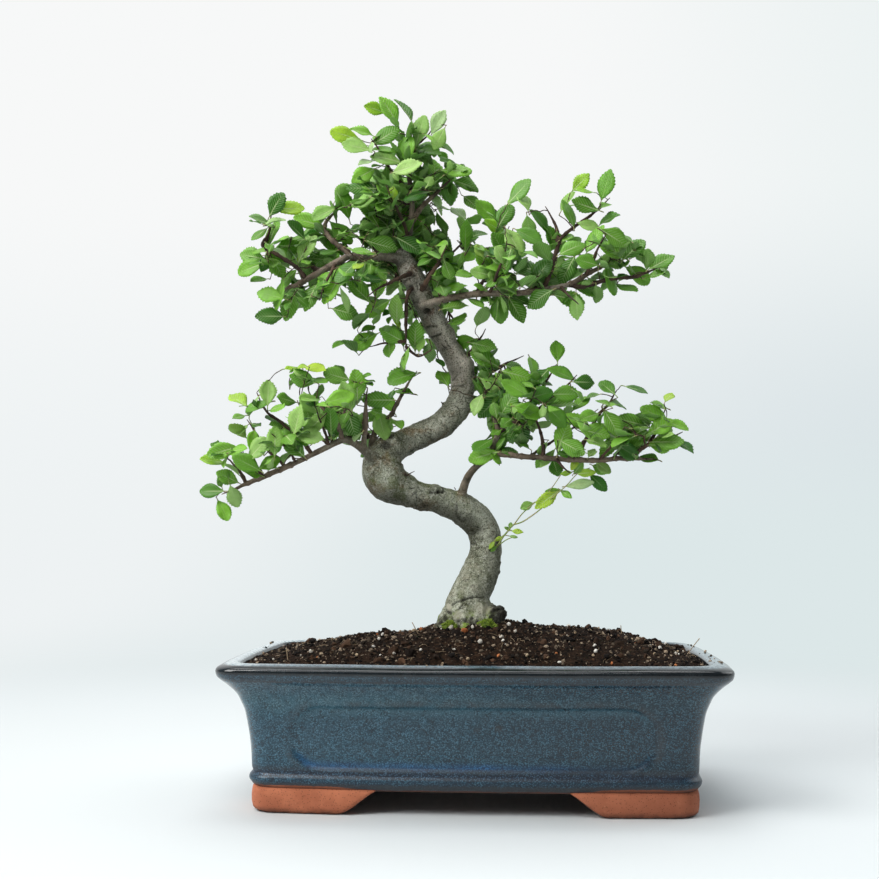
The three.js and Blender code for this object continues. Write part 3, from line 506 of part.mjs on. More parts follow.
    [58.4, -8.6, 237.3, 0.53, 0.84, 0.07, -0.69, 0.39, 0.61, 15.4, 8.5],
    [62.4, -31, 254, 0.55, -0.61, -0.57, 0.39, -0.41, 0.82, 10.4, 5.9],
    [40.2, -17.8, 236.6, -0.41, 0.71, -0.57, -0.59, 0.27, 0.76, 10.6, 6.1],
    [32.7, -8.1, 261.3, 0.58, 0.75, -0.31, -0.17, 0.49, 0.85, 16.9, 9.9],
    [37.7, -32.3, 255.4, -0.67, 0.61, 0.42, 0.01, -0.56, 0.83, 10.5, 5.7],
    [79.7, -21.5, 252.2, -0.74, 0.65, -0.13, -0.46, -0.36, 0.81, 15.9, 9.5],
    [45.4, -20.8, 246.6, 0.74, -0.65, 0.13, -0.56, -0.51, 0.65, 10.5, 5.3],
    [44.9, -42.1, 243.2, 0.68, 0.3, -0.67, 0.3, -0.95, -0.12, 20.9, 10.4],
    [64.7, -18, 261.3, -0.86, 0.1, 0.5, 0.26, -0.77, 0.58, 21.6, 11.3],
    [35.2, -4.9, 279.9, 0.23, -0.61, -0.75, 0.6, -0.52, 0.6, 16.1, 8.4],
    [62.6, -27.8, 259.5, 0.97, 0.26, 0.02, 0.26, -0.96, 0.06, 15.8, 9.4],
    [48.5, -11.6, 270.8, -0.68, -0.18, -0.71, -0.21, -0.88, 0.43, 18.8, 11],
    [33.6, -18.9, 240.8, -0.03, -0.97, -0.25, 0.25, -0.25, 0.93, 15.8, 9.1],
    [49, -24.6, 252.2, 0.99, -0.13, -0.02, -0.13, -0.99, 0.06, 18.4, 10.9],
  ]],
  ["shoot_right_lower_3", [26.8, 18, 241.5, 1.2], [32.2, 17.1, 240.4], [
    [48, 31.9, 253.3, -0.06, 0.93, 0.36, -0.19, -0.36, 0.91, 14.7, 8.3],
    [17.3, -1.3, 241.1, 0.47, 0.3, -0.83, 0.61, -0.79, 0.06, 22.1, 13],
    [65.3, -1.4, 225, -0.66, 0.71, 0.22, 0.62, 0.36, 0.69, 18.3, 9.4],
    [17.5, 27, 245.7, -0.93, 0.36, -0.13, 0.1, 0.55, 0.83, 13.7, 7.7],
    [37.5, 3.4, 247.8, 0.16, 0.9, 0.41, -0.44, -0.31, 0.84, 13.3, 7.6],
    [29.9, 19.7, 232.8, 0.46, 0.79, 0.42, -0.64, -0.04, 0.77, 15.9, 8.3],
    [62.8, 16, 226.2, -0.06, 1, 0.01, 0.21, 0, 0.98, 14.9, 8.1],
    [34.7, 35.6, 251.8, -0.66, 0.75, 0.05, 0.38, 0.28, 0.88, 15.6, 9],
    [15.7, 5.6, 247.2, -0.15, 0.94, -0.31, 0.45, 0.34, 0.82, 17.4, 9.5],
    [54.1, 5.7, 237.5, 0.63, 0.52, 0.58, -0.78, 0.5, 0.39, 17.2, 8.3],
    [5.7, 7.5, 225.6, 0.68, 0.58, 0.46, -0.65, 0.19, 0.73, 16.8, 8.5],
    [30, -9, 236, 0.54, 0.83, 0.13, -0.46, 0.16, 0.87, 12.7, 6.5],
    [41, 9.7, 243.4, 0.94, 0.35, 0.01, -0.24, 0.64, 0.73, 15.5, 8.1],
    [30.3, 14, 233.8, -0.84, -0.26, 0.48, 0.39, 0.33, 0.86, 15, 8.2],
    [44.5, 8.5, 252.9, 0.14, 0.97, 0.2, 0.52, -0.24, 0.82, 19.1, 10.1],
    [35.8, 24, 244.7, -0.14, 0.98, 0.15, -0.11, -0.16, 0.98, 14, 7.3],
  ]],
  ["shoot_right_lower_4", [113.6, -16.5, 226, 1], [105.2, -13.8, 230.2], [
    [96.8, 25.3, 231.7, -0.29, 0.94, -0.17, 0.11, 0.2, 0.97, 13.6, 7.5],
    [88.7, -33, 250.2, -0.61, 0.5, 0.62, 0.12, -0.71, 0.69, 16.3, 9.8],
    [127.1, -14.9, 223.1, 0.67, -0.61, -0.42, -0.02, -0.58, 0.81, 15.7, 8.1],
    [93.3, -9, 227.7, -0.68, -0.18, -0.71, -0.24, -0.86, 0.46, 21.6, 10.4],
    [120.5, -23, 246.8, 0.47, 0.68, 0.57, -0.04, -0.63, 0.78, 13.2, 6.2],
    [103.4, -27.1, 227.5, 0.67, -0.67, 0.3, -0.11, 0.31, 0.94, 10.3, 5.5],
    [107.7, 6.4, 241.6, 0.81, 0.58, 0.09, -0.14, 0.03, 0.99, 19.3, 10.8],
    [116.9, -17.8, 210.2, -0.74, 0.62, 0.24, -0.33, -0.65, 0.68, 15.9, 8.7],
    [109.3, 6.3, 221.3, -0.45, 0.89, 0.01, 0.55, 0.27, 0.79, 19.4, 10.7],
    [94.8, -22.5, 257.3, 0.96, -0.11, -0.27, 0.16, -0.57, 0.8, 15.8, 8.9],
    [105.2, -8.3, 234.8, -0.46, 0.66, -0.59, -0.36, 0.47, 0.8, 15, 7.2],
    [87.4, -26.1, 220.9, 0.83, 0.29, -0.47, 0.3, -0.95, -0.06, 21.2, 10.5],
    [121.6, -13.8, 228.1, -0.68, 0.01, 0.73, 0.73, 0.05, 0.68, 14.5, 8.3],
    [116.5, -22.7, 225, 0.74, -0.65, 0.13, -0.56, -0.5, 0.66, 10.4, 5.3],
    [92.7, -24.9, 235.4, 0.03, 0.99, -0.14, 0.61, 0.09, 0.79, 13.4, 7.8],
    [91.2, 5.3, 238.6, 0.75, 0.62, -0.22, -0.31, 0.63, 0.71, 15.5, 8.3],
  ]],
  ["shoot_right_lower_5", [20, -17, 214.4, 1.7], [22.8, -13.1, 218.6], [
    [21.9, -9.7, 168.6, 0.67, -0.61, -0.42, 0.16, -0.43, 0.89, 10.6, 6.1],
    [25.1, -7.9, 240, -0.96, 0.15, -0.24, -0.28, -0.66, 0.7, 18.9, 9.4],
    [38.3, -30.6, 210.4, 0.58, 0.76, -0.3, -0.16, 0.47, 0.87, 13.1, 7.5],
    [15, -19.2, 216.1, -0.96, 0.15, -0.24, -0.16, -0.99, 0, 21.6, 10.7],
    [35.6, -14, 184.4, -0.58, -0.7, -0.42, 0.03, -0.53, 0.85, 10.5, 6],
    [35, -19.7, 217.7, -0.67, 0.61, 0.42, 0.16, -0.43, 0.89, 10.6, 6.1],
    [40.2, -15.5, 231.4, -0.86, 0.1, 0.5, 0.35, -0.6, 0.72, 21.6, 11.2],
    [12.6, 10.8, 225.5, 0.1, -0.94, -0.33, 0.47, -0.25, 0.85, 17, 9.3],
    [14.5, -6.5, 213.7, 0.05, -0.75, 0.66, -0.82, 0.35, 0.45, 10.7, 5.1],
    [46.2, -27.1, 221.9, -0.41, 0.71, -0.57, -0.4, 0.42, 0.82, 13.1, 6.8],
    [16.5, -22.7, 215.6, 0.68, 0.73, 0.06, 0.48, -0.5, 0.72, 15.9, 8.9],
    [12.1, -9, 237.5, 0.24, 0.29, -0.93, 0.5, -0.85, -0.14, 21.9, 11.8],
    [10.9, -15.2, 217.3, 0.4, -0.61, -0.68, 0.5, -0.48, 0.72, 13.2, 7.7],
    [25.4, -13.8, 234.9, -0.4, 0.61, 0.68, 0.52, -0.46, 0.72, 10.7, 5.2],
    [11.7, -12.1, 225, -0.64, -0.63, -0.44, -0.1, -0.5, 0.86, 20, 11.8],
    [25.2, -13.5, 239.8, 0.47, 0.3, -0.83, 0.62, -0.78, 0.07, 21.7, 12.8],
  ]],
  ["shoot_right_lower_6", [67.3, -25, 217.8, 1.3], [69.6, -31.1, 214.7], [
    [52.4, -24.8, 190.7, -0.86, 0.18, -0.47, -0.46, -0.66, 0.59, 18.4, 9.2],
    [85.1, -38.3, 242.5, -0.67, 0.61, 0.42, 0.08, -0.5, 0.86, 12.9, 6.3],
    [78, -23.2, 208.5, 0.67, -0.61, -0.42, 0.14, -0.44, 0.88, 10.4, 5.8],
    [52.3, -28.7, 213.9, 0.27, -0.26, 0.93, -0.45, -0.88, -0.11, 21.1, 11.8],
    [62.7, -6.6, 213.9, -0.19, 0.97, -0.13, -0.03, 0.13, 0.99, 13.6, 7.9],
    [98.5, -49.4, 222.9, -0.87, -0.34, -0.37, -0.25, -0.34, 0.91, 16.9, 9.8],
    [52.8, -42.7, 201.9, 0.77, -0.64, -0.06, -0.28, -0.42, 0.86, 15.2, 7.3],
    [67.8, -12.6, 234.7, 0.33, 0.93, -0.15, 0.38, 0.02, 0.93, 18.4, 10.1],
    [68.7, -41.2, 231.8, -0.09, -0.97, -0.23, 0.41, -0.25, 0.88, 15.1, 8.8],
    [54.3, -25.7, 199.3, -0.5, 0.09, 0.86, 0.46, -0.82, 0.35, 21.3, 12.6],
    [65.7, -31.2, 229.4, 0.96, -0.11, -0.27, 0.02, -0.9, 0.44, 21, 11.8],
    [57.7, -32.4, 196.1, 0.99, -0.13, -0.02, -0.1, -0.81, 0.57, 18.1, 9.2],
    [53.8, -41, 221.1, 0.86, -0.1, -0.5, -0.03, -0.99, 0.14, 17.9, 10.7],
    [73.8, -22.7, 229.8, -0.83, -0.29, 0.47, 0.5, -0.76, 0.41, 21.3, 10.8],
    [80.7, -36.6, 241.3, 0.5, -0.09, -0.86, 0.4, -0.86, 0.32, 20.9, 11.8],
    [88.1, -27.4, 212, 0.24, -0.73, 0.64, -0.75, 0.28, 0.6, 10.3, 5.8],
  ]],
  ["shoot_right_mid_1", [13.8, 61.3, 281.6, 1.9], [15.1, 64, 275.9], [
    [-3.6, 62, 273, -0.45, 0.84, -0.3, 0.11, 0.38, 0.92, 18.9, 10.5],
    [38.2, 76.9, 276.8, -0.67, 0.65, 0.35, 0.24, -0.26, 0.94, 12.7, 6.6],
    [19.4, 36.5, 271.8, 0.51, 0.79, -0.34, 0.3, 0.2, 0.93, 16.4, 8.2],
    [10.8, 53.3, 293.6, -0.24, 0.95, 0.21, 0.18, -0.17, 0.97, 13.8, 7.4],
    [12.1, 74.2, 265.7, 0.62, -0.66, 0.43, -0.54, 0.04, 0.84, 18.2, 9.4],
    [8.9, 52.4, 258.1, 0.93, 0.27, 0.23, -0.28, 0.19, 0.94, 12.7, 6.7],
    [5.2, 75, 275.2, -0.29, 0.95, 0.09, -0.05, -0.11, 0.99, 15.7, 8.5],
    [0.5, 49.4, 273.8, 0.67, 0.74, 0, -0, -0, 1, 19.3, 10.7],
    [34.8, 61, 265.7, -0.58, 0.81, -0.11, -0.81, -0.59, 0, 12.9, 7.6],
    [30, 47.5, 270.7, 0.51, 0.85, 0.15, -0.51, 0.15, 0.85, 14.5, 8.5],
    [11.8, 42.9, 285, -0.68, 0.72, 0.16, 0.06, -0.16, 0.99, 19.3, 10.4],
    [10.7, 60.4, 284.7, -0.28, 0.95, -0.13, -0.08, 0.11, 0.99, 14.7, 8.8],
    [-2.7, 56.4, 300.5, 0.1, 0.99, -0.08, 0.1, 0.07, 0.99, 12.6, 6.3],
    [25.1, 50.6, 280.5, -0.7, 0.21, -0.68, -0.44, 0.63, 0.64, 18.6, 10.2],
    [31.3, 68.6, 281, -0.72, 0.68, 0.14, 0.05, -0.14, 0.99, 14.4, 8],
    [21.7, 70.8, 271.5, 0.3, 0.95, 0.03, 0.13, -0.07, 0.99, 13.4, 7.1],
  ]],
  ["shoot_right_mid_2", [-1.1, 41, 270.5, 2.8], [-3.2, 42.3, 269.1], [
    [-4.1, 28.2, 284.3, -0.94, 0.07, 0.33, 0.21, 0.89, 0.42, 14.7, 8.2],
    [16.4, 54.3, 251.7, -0.35, -0.92, 0.16, -0.05, 0.19, 0.98, 16.5, 9.5],
    [-3.7, 56.1, 274.3, -0.49, 0.85, 0.21, 0.24, -0.1, 0.97, 13.2, 7.3],
    [-10.6, 28.4, 259.2, -0.19, 0.98, 0.03, -0.37, -0.11, 0.92, 15.3, 8.8],
    [12.8, 23.6, 265.7, 0.72, 0.7, 0.03, -0.37, 0.34, 0.86, 14.8, 8.6],
    [3.5, 36.4, 278.2, 0.51, 0.84, 0.17, -0.39, 0.06, 0.92, 17.7, 8.8],
    [-19.7, 48, 259, 0.33, 0.94, -0.08, -0.26, 0.17, 0.95, 13.8, 7.5],
    [-18.2, 37.7, 277.4, 0.72, 0.67, -0.16, 0.35, -0.16, 0.93, 17.3, 9.4],
    [0.9, 45.1, 264.2, 0.24, 0.91, 0.33, -0.19, -0.29, 0.94, 15.7, 9.1],
    [3.4, 21.5, 277.6, 0.26, 0.85, -0.46, 0.27, 0.4, 0.88, 14.8, 8.6],
    [1.8, 37.1, 273, -0.56, 0.05, -0.82, -0.56, 0.72, 0.42, 12.7, 7.1],
    [-12.7, 27.7, 269.6, -0.85, 0.53, -0.09, 0.15, 0.4, 0.9, 16, 8.8],
    [-12.5, 48.8, 258.8, 0.76, 0.62, -0.17, -0.14, 0.42, 0.9, 19.3, 10.5],
    [-9.2, 32.8, 250.2, 0.61, 0.77, 0.17, -0.59, 0.31, 0.75, 18.5, 10.7],
    [11.9, 41.6, 268.8, 0.12, 0.99, 0.02, -0.21, 0, 0.98, 13.5, 7.9],
    [-21.3, 46, 276.8, 0.51, 0.84, -0.19, -0.55, 0.49, 0.68, 17.6, 9.9],
  ]],
  ["shoot_right_upper_1", [14, 21.4, 354.2, 1.2], [8.1, 14.2, 362.4], [
    [-7.5, 37.3, 367.3, 0.31, 0.95, -0.01, 0.26, -0.07, 0.96, 16.4, 8.3],
    [14.6, -10.9, 363.4, 0.48, 0.16, 0.86, 0.04, -0.99, 0.16, 22.1, 11],
    [12, 8, 340.5, -0.88, 0.48, -0.04, 0.12, 0.3, 0.95, 18.2, 8.8],
    [-8.6, 16.7, 393.7, 0.61, -0.5, -0.62, -0.15, -0.83, 0.53, 17.6, 8.9],
    [24.8, 21.6, 365.3, 0.39, 0.78, -0.5, -0.42, 0.63, 0.65, 17.8, 10.1],
    [-8.1, -2.6, 362.1, -0.14, -0.76, 0.64, 0.6, 0.45, 0.66, 13.7, 7.8],
    [-8, 17.3, 369.2, 0.5, 0.85, -0.13, -0.12, 0.21, 0.97, 14.1, 7.3],
    [19.6, 11.3, 374, -0.54, 0.37, -0.76, -0.4, 0.68, 0.62, 13.5, 7.5],
    [14.1, 33.6, 373.1, -0.43, 0.7, 0.57, 0.88, 0.19, 0.43, 18.4, 9.4],
    [16.4, -5.4, 351.1, 0.06, 1, 0.06, -0.08, -0.06, 1, 17.5, 9.9],
    [14.7, 9, 372.3, -0.68, -0.3, 0.67, 0.41, -0.91, 0.01, 22.6, 11.6],
    [-9.5, 21.9, 352.3, -0, -0.72, -0.69, 1, 0.01, -0.01, 14.9, 7.7],
    [-3.1, -6.7, 358.7, 0.63, 0.64, 0.44, 0.14, -0.65, 0.75, 18, 9.1],
    [-9.3, 12.9, 373, 0.34, -0.93, -0.12, -0.24, -0.21, 0.95, 14.3, 7.1],
    [23, 33.6, 354.2, -0.15, 0.97, 0.19, 0.26, -0.15, 0.96, 15.7, 8.3],
    [12.6, 11.9, 382.2, -0.03, 0.98, -0.18, 0.17, 0.18, 0.97, 18.6, 10.1],
  ]],
  ["shoot_right_upper_2", [62.9, -8.5, 362.5, 1.1], [59.3, -2.1, 361.8], [
    [83, -8.3, 381.6, 0.27, -0.26, 0.93, -0.42, -0.9, -0.13, 22, 12.1],
    [43.1, 15.1, 337.1, 0.03, 0.95, 0.32, 0.02, -0.32, 0.95, 19.1, 9.4],
    [22.1, -13.1, 379.6, 0.71, -0.21, 0.67, -0.43, -0.88, 0.18, 22, 12.7],
    [57.2, -14.8, 352.7, 0.47, 0.68, 0.57, -0.06, -0.62, 0.79, 13.5, 7.8],
    [56.5, -4.2, 375.5, 0.5, -0.29, 0.81, -0.78, -0.55, 0.28, 16.7, 9.8],
    [34.1, -22.7, 369.2, 0.17, 0.64, -0.75, 0.36, 0.67, 0.66, 16.5, 9.7],
    [62.7, 6.5, 361.5, 0.32, 0.95, 0.03, 0.07, -0.05, 1, 16.9, 9.8],
    [81.6, -3.2, 366.4, 0.75, -0.55, 0.36, -0.65, -0.56, 0.51, 16.7, 9.6],
    [81.9, -15.2, 372.8, -0.93, -0.28, 0.24, 0.32, -0.93, 0.16, 21.8, 11.2],
    [63.7, 7, 347.8, -0.65, -0.72, -0.24, 0.14, -0.43, 0.89, 11, 6.3],
    [64, -9, 388.1, 0.71, -0.21, 0.67, -0.17, -0.98, -0.12, 16.4, 9.7],
    [79.4, -2.1, 360.4, -0.42, 0.66, -0.62, 0.02, 0.69, 0.73, 13.5, 7.2],
    [64.5, -14.8, 362.4, -0.26, 0.1, 0.96, 0.72, -0.65, 0.26, 21.9, 12.6],
    [56.5, 11.2, 345.2, 0.15, 0.85, -0.5, 0.36, 0.42, 0.83, 15.5, 8.5],
    [66.4, -9.9, 367, 0.87, -0.41, -0.27, -0.19, -0.78, 0.59, 15.7, 8.3],
    [54.1, -17.2, 352.4, -0.56, 0.69, -0.45, -0.12, 0.48, 0.87, 10.8, 5.1],
  ]],
  ["shoot_right_upper_3", [95.6, -14.7, 342.1, 0.8], [96.7, -17.2, 339.4], [
    [83.3, 16.1, 333.4, 0.53, 0.35, 0.77, -0.82, 0.44, 0.36, 15.8, 8.5],
    [80.2, -34.6, 355.7, 0.83, 0.29, -0.47, 0.35, -0.94, 0.03, 21.3, 10.8],
    [120, -15.9, 333, 0.58, 0.76, -0.3, -0.11, 0.44, 0.89, 10.7, 5.4],
    [88.5, -19.4, 327, -0.56, 0.69, -0.45, -0.23, 0.39, 0.89, 10.7, 5.8],
    [98.6, -17.2, 345.6, -0.02, 1, 0.01, -0.26, -0.02, 0.96, 16.4, 9.6],
    [72.4, -17.4, 344.8, 0.51, -0.23, 0.83, -0.66, -0.73, 0.19, 21.7, 12.5],
    [110.8, -15.1, 332.9, 0.05, -0.75, 0.66, 0.34, 0.64, 0.69, 18.5, 8.7],
    [78.2, -21.1, 338.8, 0.97, 0.26, 0.02, 0.23, -0.88, 0.41, 21.7, 12.1],
    [85.3, -17.8, 359.5, 0.77, -0.64, -0.06, -0.34, -0.48, 0.81, 10.6, 5.8],
    [96.8, -14.7, 336.2, 0.83, 0.29, -0.47, 0.33, -0.94, -0.01, 21.8, 10.9],
    [90.1, -16.5, 325, 0.75, -0.48, -0.46, 0.06, -0.64, 0.77, 18.9, 11.2],
    [95.2, -23.2, 338.2, 0.68, 0.18, 0.71, -0.08, -0.94, 0.32, 21.6, 11.4],
    [100.2, -13.6, 340.8, -0.47, -0.68, -0.57, -0.29, -0.49, 0.82, 10.7, 5.6],
    [93.1, -15.4, 326.2, 0.47, 0.68, 0.57, 0.11, -0.68, 0.72, 13.4, 6.8],
    [95.2, -5.8, 344.1, 0.2, 0.91, 0.37, -0.57, -0.2, 0.8, 18.9, 10.5],
    [87.7, -20.7, 328, -0.18, -0.95, -0.26, 0.05, -0.28, 0.96, 17.1, 9.1],
  ]],
  ["shoot_right_upper_4", [25, -25.8, 317.1, 2.2], [25.1, -20.5, 332.6], [
    [30, -49.3, 316, 0.45, -0.84, 0.29, -0.24, 0.2, 0.95, 16.5, 9.2],
    [18.9, -5.4, 332.2, -0.64, 0.76, 0.14, -0.15, -0.3, 0.94, 18.9, 9.5],
    [26.8, -25.3, 358.9, 0.86, -0.1, -0.5, 0.19, -0.85, 0.49, 21.6, 12.7],
    [21.5, -22.3, 316.1, 0.5, -0.09, -0.86, 0.3, -0.91, 0.27, 21.6, 11.4],
    [-1.4, -18.8, 349.9, 0.74, -0.62, -0.24, -0.12, -0.48, 0.87, 10.7, 5.7],
    [47.2, -12.2, 324, -0.96, 0.11, 0.27, 0.16, -0.57, 0.81, 21.9, 12.5],
    [28.8, -39.1, 340.8, 0.77, -0.59, -0.25, -0.04, -0.43, 0.9, 15, 7.3],
    [25.7, -15.1, 343.8, -0.24, 0.73, -0.64, -0.75, 0.28, 0.6, 10.8, 6.1],
    [4.4, -21.6, 334.9, 0.55, -0.79, -0.27, -0.06, -0.36, 0.93, 19.1, 11.1],
    [15, -20, 320.1, 0.42, 0.85, 0.31, -0.86, 0.49, -0.18, 13.6, 6.7],
    [49.3, -20.5, 338.3, -0.5, -0.72, 0.49, -0.1, 0.61, 0.79, 20.4, 10.7],
    [24, -2.7, 321.4, 0.19, 0.98, -0.12, 0.27, 0.07, 0.96, 16.1, 9.2],
    [19.4, -46.7, 330.2, -0.33, -0.24, 0.91, 0.51, -0.86, -0.04, 13.4, 7.3],
    [15.1, -32.7, 320, 0.81, -0.5, -0.31, 0.11, -0.39, 0.91, 15.2, 7.5],
    [8.7, -8.3, 332.3, -0.24, -0.29, 0.93, 0.43, -0.89, -0.17, 22, 11.5],
    [21.8, -12.5, 341.5, -0.47, -0.3, 0.83, 0.54, -0.84, 0, 21.9, 12.1],
  ]],
  ["shoot_right_upper_5", [64.3, -23.7, 324.4, 1.7], [61.3, -19, 327.8], [
    [50.6, -35.8, 317.3, -0.86, 0.18, -0.47, -0.37, -0.87, 0.33, 21.3, 12.6],
    [84.5, -17.2, 327, -0.67, 0.61, 0.42, -0.28, -0.73, 0.62, 13.4, 6.4],
    [44.5, 0.7, 329.1, 0.63, 0.71, -0.32, -0.16, 0.52, 0.84, 16, 8.5],
    [54.3, -32.8, 340.1, 0.84, 0.21, 0.5, -0.02, -0.91, 0.41, 21.4, 11.8],
    [65.1, -27, 315.6, 0.02, -0.35, -0.94, -0.27, -0.91, 0.33, 19.9, 9.5],
    [44, -19, 324.9, 0.68, 0.73, 0.06, 0.44, -0.46, 0.77, 10.7, 5.3],
    [79.2, -28, 331.8, 0.05, -0.75, 0.66, -0.89, 0.27, 0.36, 10.5, 6.2],
    [65, -17.4, 342.7, -0.48, -0.16, -0.86, -0.13, -0.96, 0.25, 21.7, 11.2],
    [50.8, -4.3, 325.2, 0.27, -0.26, 0.93, -0.55, -0.83, -0.07, 22, 10.6],
    [77.8, -25.1, 322.1, 0.14, 0.76, -0.64, 0.48, 0.52, 0.71, 13.3, 7.7],
    [72.7, -16.6, 335.5, -0.67, 0.67, -0.3, -0.12, 0.31, 0.94, 16.2, 8.6],
    [51, -23.4, 316.2, 0.96, -0.11, -0.27, -0.09, -0.99, 0.1, 21.5, 10.6],
    [61.4, -21.7, 321.9, 0.97, 0.26, 0.02, 0.22, -0.85, 0.47, 21.6, 12.6],
    [78.9, -34.3, 332.4, -0.93, -0.28, 0.24, 0.29, -0.96, 0, 15.7, 9.3],
    [51, -20.3, 335.5, -0.65, 0.7, 0.29, 0, -0.38, 0.93, 18.6, 9.6],
    [78.6, -22.6, 342.4, -0.58, -0.7, -0.42, 0.07, -0.56, 0.83, 13.2, 7.1],
  ]],
  ["shoot_right_upper_6", [-7.2, -22, 316.7, 2.4], [-7.6, -21.7, 321.7], [
    [-27.2, -32.3, 344.1, -0.28, -0.93, -0.25, -0.21, -0.2, 0.96, 14, 7.6],
    [16.1, -22.7, 318.7, -0.02, 0.28, -0.96, -0.45, -0.86, -0.24, 21.7, 12.3],
    [-15.6, -9.7, 303.2, 0.31, 0.76, -0.57, 0.45, 0.41, 0.79, 10.9, 5.2],
    [-11.5, -5.4, 336.9, 0.23, -0.97, -0.02, 0.28, 0.04, 0.96, 13.1, 6.6],
    [11, -26.8, 328.4, -0.93, -0.28, 0.24, 0.29, -0.96, 0, 13.7, 8.1],
    [-20.5, -13.7, 316.8, -0.58, -0.76, 0.3, 0.1, 0.3, 0.95, 10.7, 6],
    [11.4, -13.5, 324.9, -0.74, 0.65, -0.13, -0.59, -0.55, 0.59, 10.8, 6.1],
    [-4.7, -19.4, 315.5, 0.67, -0.61, -0.42, 0.11, -0.48, 0.87, 15.9, 8.2],
    [-19.1, -32.6, 338.2, 0.35, -0.01, -0.94, 0.37, -0.92, 0.15, 14.8, 8.2],
    [-21, -25.4, 307.4, 0.93, 0.24, 0.27, -0.04, -0.68, 0.74, 18.7, 8.9],
    [1, -8.9, 298.7, 0.41, -0.71, 0.57, -0.36, 0.44, 0.82, 18.8, 11.1],
    [-8.7, -17.1, 321.2, 0.26, 0.93, -0.27, -0.01, 0.28, 0.96, 12.8, 7.5],
    [-20.5, -17.7, 338.9, -0.28, -0.85, 0.45, 0.19, 0.41, 0.89, 13.5, 7.5],
    [-21.1, -24.7, 318.7, 0.92, 0.28, 0.27, -0, -0.69, 0.72, 18.9, 11.3],
    [13.1, -31.6, 324.2, -0.16, -0.85, -0.51, -0.21, -0.47, 0.86, 14.7, 7.4],
    [-19.9, -7.7, 325, 0.56, -0.69, 0.45, -0.16, 0.45, 0.88, 13.5, 6.7],
  ]],
];

// ---- materials ----------------------------------------------------------
const mat = (color, roughness, metalness = 0) => new THREE.MeshStandardMaterial({ color, roughness, metalness });
const potMat = mat(0x46606f, 0.25);
const soilMat = mat(0x3b2a20, 0.95);
const barkMat = mat(0x76695a, 0.85);
const mossMat = mat(0x6f8a2e, 0.95);
const leafMat = mat(0x4c8a34, 0.5);
const netMat = mat(0x23272a, 0.6);

// ---- solids -------------------------------------------------------------
const wasm = await Module();
wasm.setup();

// A closed three.js geometry as a manifold-3d solid facing out.
function solid(geometry) {
  let g = geometry.clone();
  for (const name of Object.keys(g.attributes)) if (name !== "position") g.deleteAttribute(name);
  if (!g.index) g.setIndex([...Array(g.attributes.position.count).keys()]);
  g = mergeVertices(g, 1e-4);
  const src = g.index.array, tri = [];
  for (let i = 0; i < src.length; i += 3) {
    const [a, b, c] = [src[i], src[i + 1], src[i + 2]];
    if (a !== b && b !== c && a !== c) tri.push(a, b, c);
  }
  const make = (t) => new wasm.Manifold(new wasm.Mesh({ numProp: 3, vertProperties: new Float32Array(g.attributes.position.array), triVerts: new Uint32Array(t) }));
  const m = make(tri);
  if (m.volume() > 0) return m;
  for (let i = 0; i < tri.length; i += 3) [tri[i + 1], tri[i + 2]] = [tri[i + 2], tri[i + 1]];
  return make(tri);
}

function geometryOf(m) {
  const mesh = m.getMesh(), n = mesh.numProp, p = new Float32Array(mesh.numVert * 3);
  for (let i = 0; i < mesh.numVert; i++) for (let k = 0; k < 3; k++) p[3 * i + k] = mesh.vertProperties[n * i + k];
  const g = new THREE.BufferGeometry();
  g.setAttribute("position", new THREE.BufferAttribute(p, 3));
  g.setIndex(new THREE.BufferAttribute(new Uint32Array(mesh.triVerts), 1));
  g.computeVertexNormals();
  return g;
}

const lerp = (a, b, t) => a + (b - a) * t;
function table(rows, x) {
  for (let i = 1; i < rows.length; i++)
    if (x <= rows[i][0]) return lerp(rows[i - 1][1], rows[i][1], Math.max(0, (x - rows[i - 1][0]) / (rows[i][0] - rows[i - 1][0])));
  return rows[rows.length - 1][1];
}

// Plan outline of the pot at an inset from the rim: a rounded rectangle whose sides bow out.
const PLAN = [];
{
  const side = (n, f) => { for (let i = 0; i < n; i++) PLAN.push(f(i / n)); };
  const arc = (q) => { for (let i = 0; i < 3; i++) PLAN.push({ corner: q, a: (i / 3) * Math.PI / 2 }); };
  side(6, (t) => ({ sx: 1 - 2 * t, sy: 1, long: true })); arc(1);
  side(3, (t) => ({ sx: -1, sy: 1 - 2 * t })); arc(2);
  side(6, (t) => ({ sx: -1 + 2 * t, sy: -1, long: true })); arc(3);
  side(3, (t) => ({ sx: 1, sy: -1 + 2 * t })); arc(0);
}
function outline(inset) {
  const a = POT_W / 2 - inset, b = POT_D / 2 - inset, r = Math.min(CORNER_R, b * 0.5), bow = RIM_BOW * (1 - inset / 90);
  return PLAN.map((p) => {
    let x, y;
    if (p.corner !== undefined) {
      const w = p.a + Math.PI / 2 * p.corner, cx = [1, -1, -1, 1][p.corner] * (a - r), cy = [1, 1, -1, -1][p.corner] * (b - r);
      x = cx + r * Math.cos(w); y = cy + r * Math.sin(w);
    } else if (p.long) { x = p.sx * (a - r); y = p.sy * b; }
    else { x = p.sx * a; y = p.sy * (b - r); }
    return [x + Math.sign(x) * bow * SHORT_BOW * (1 - (y / b) ** 2), y + Math.sign(y) * bow * (1 - (x / a) ** 2)];
  });
}
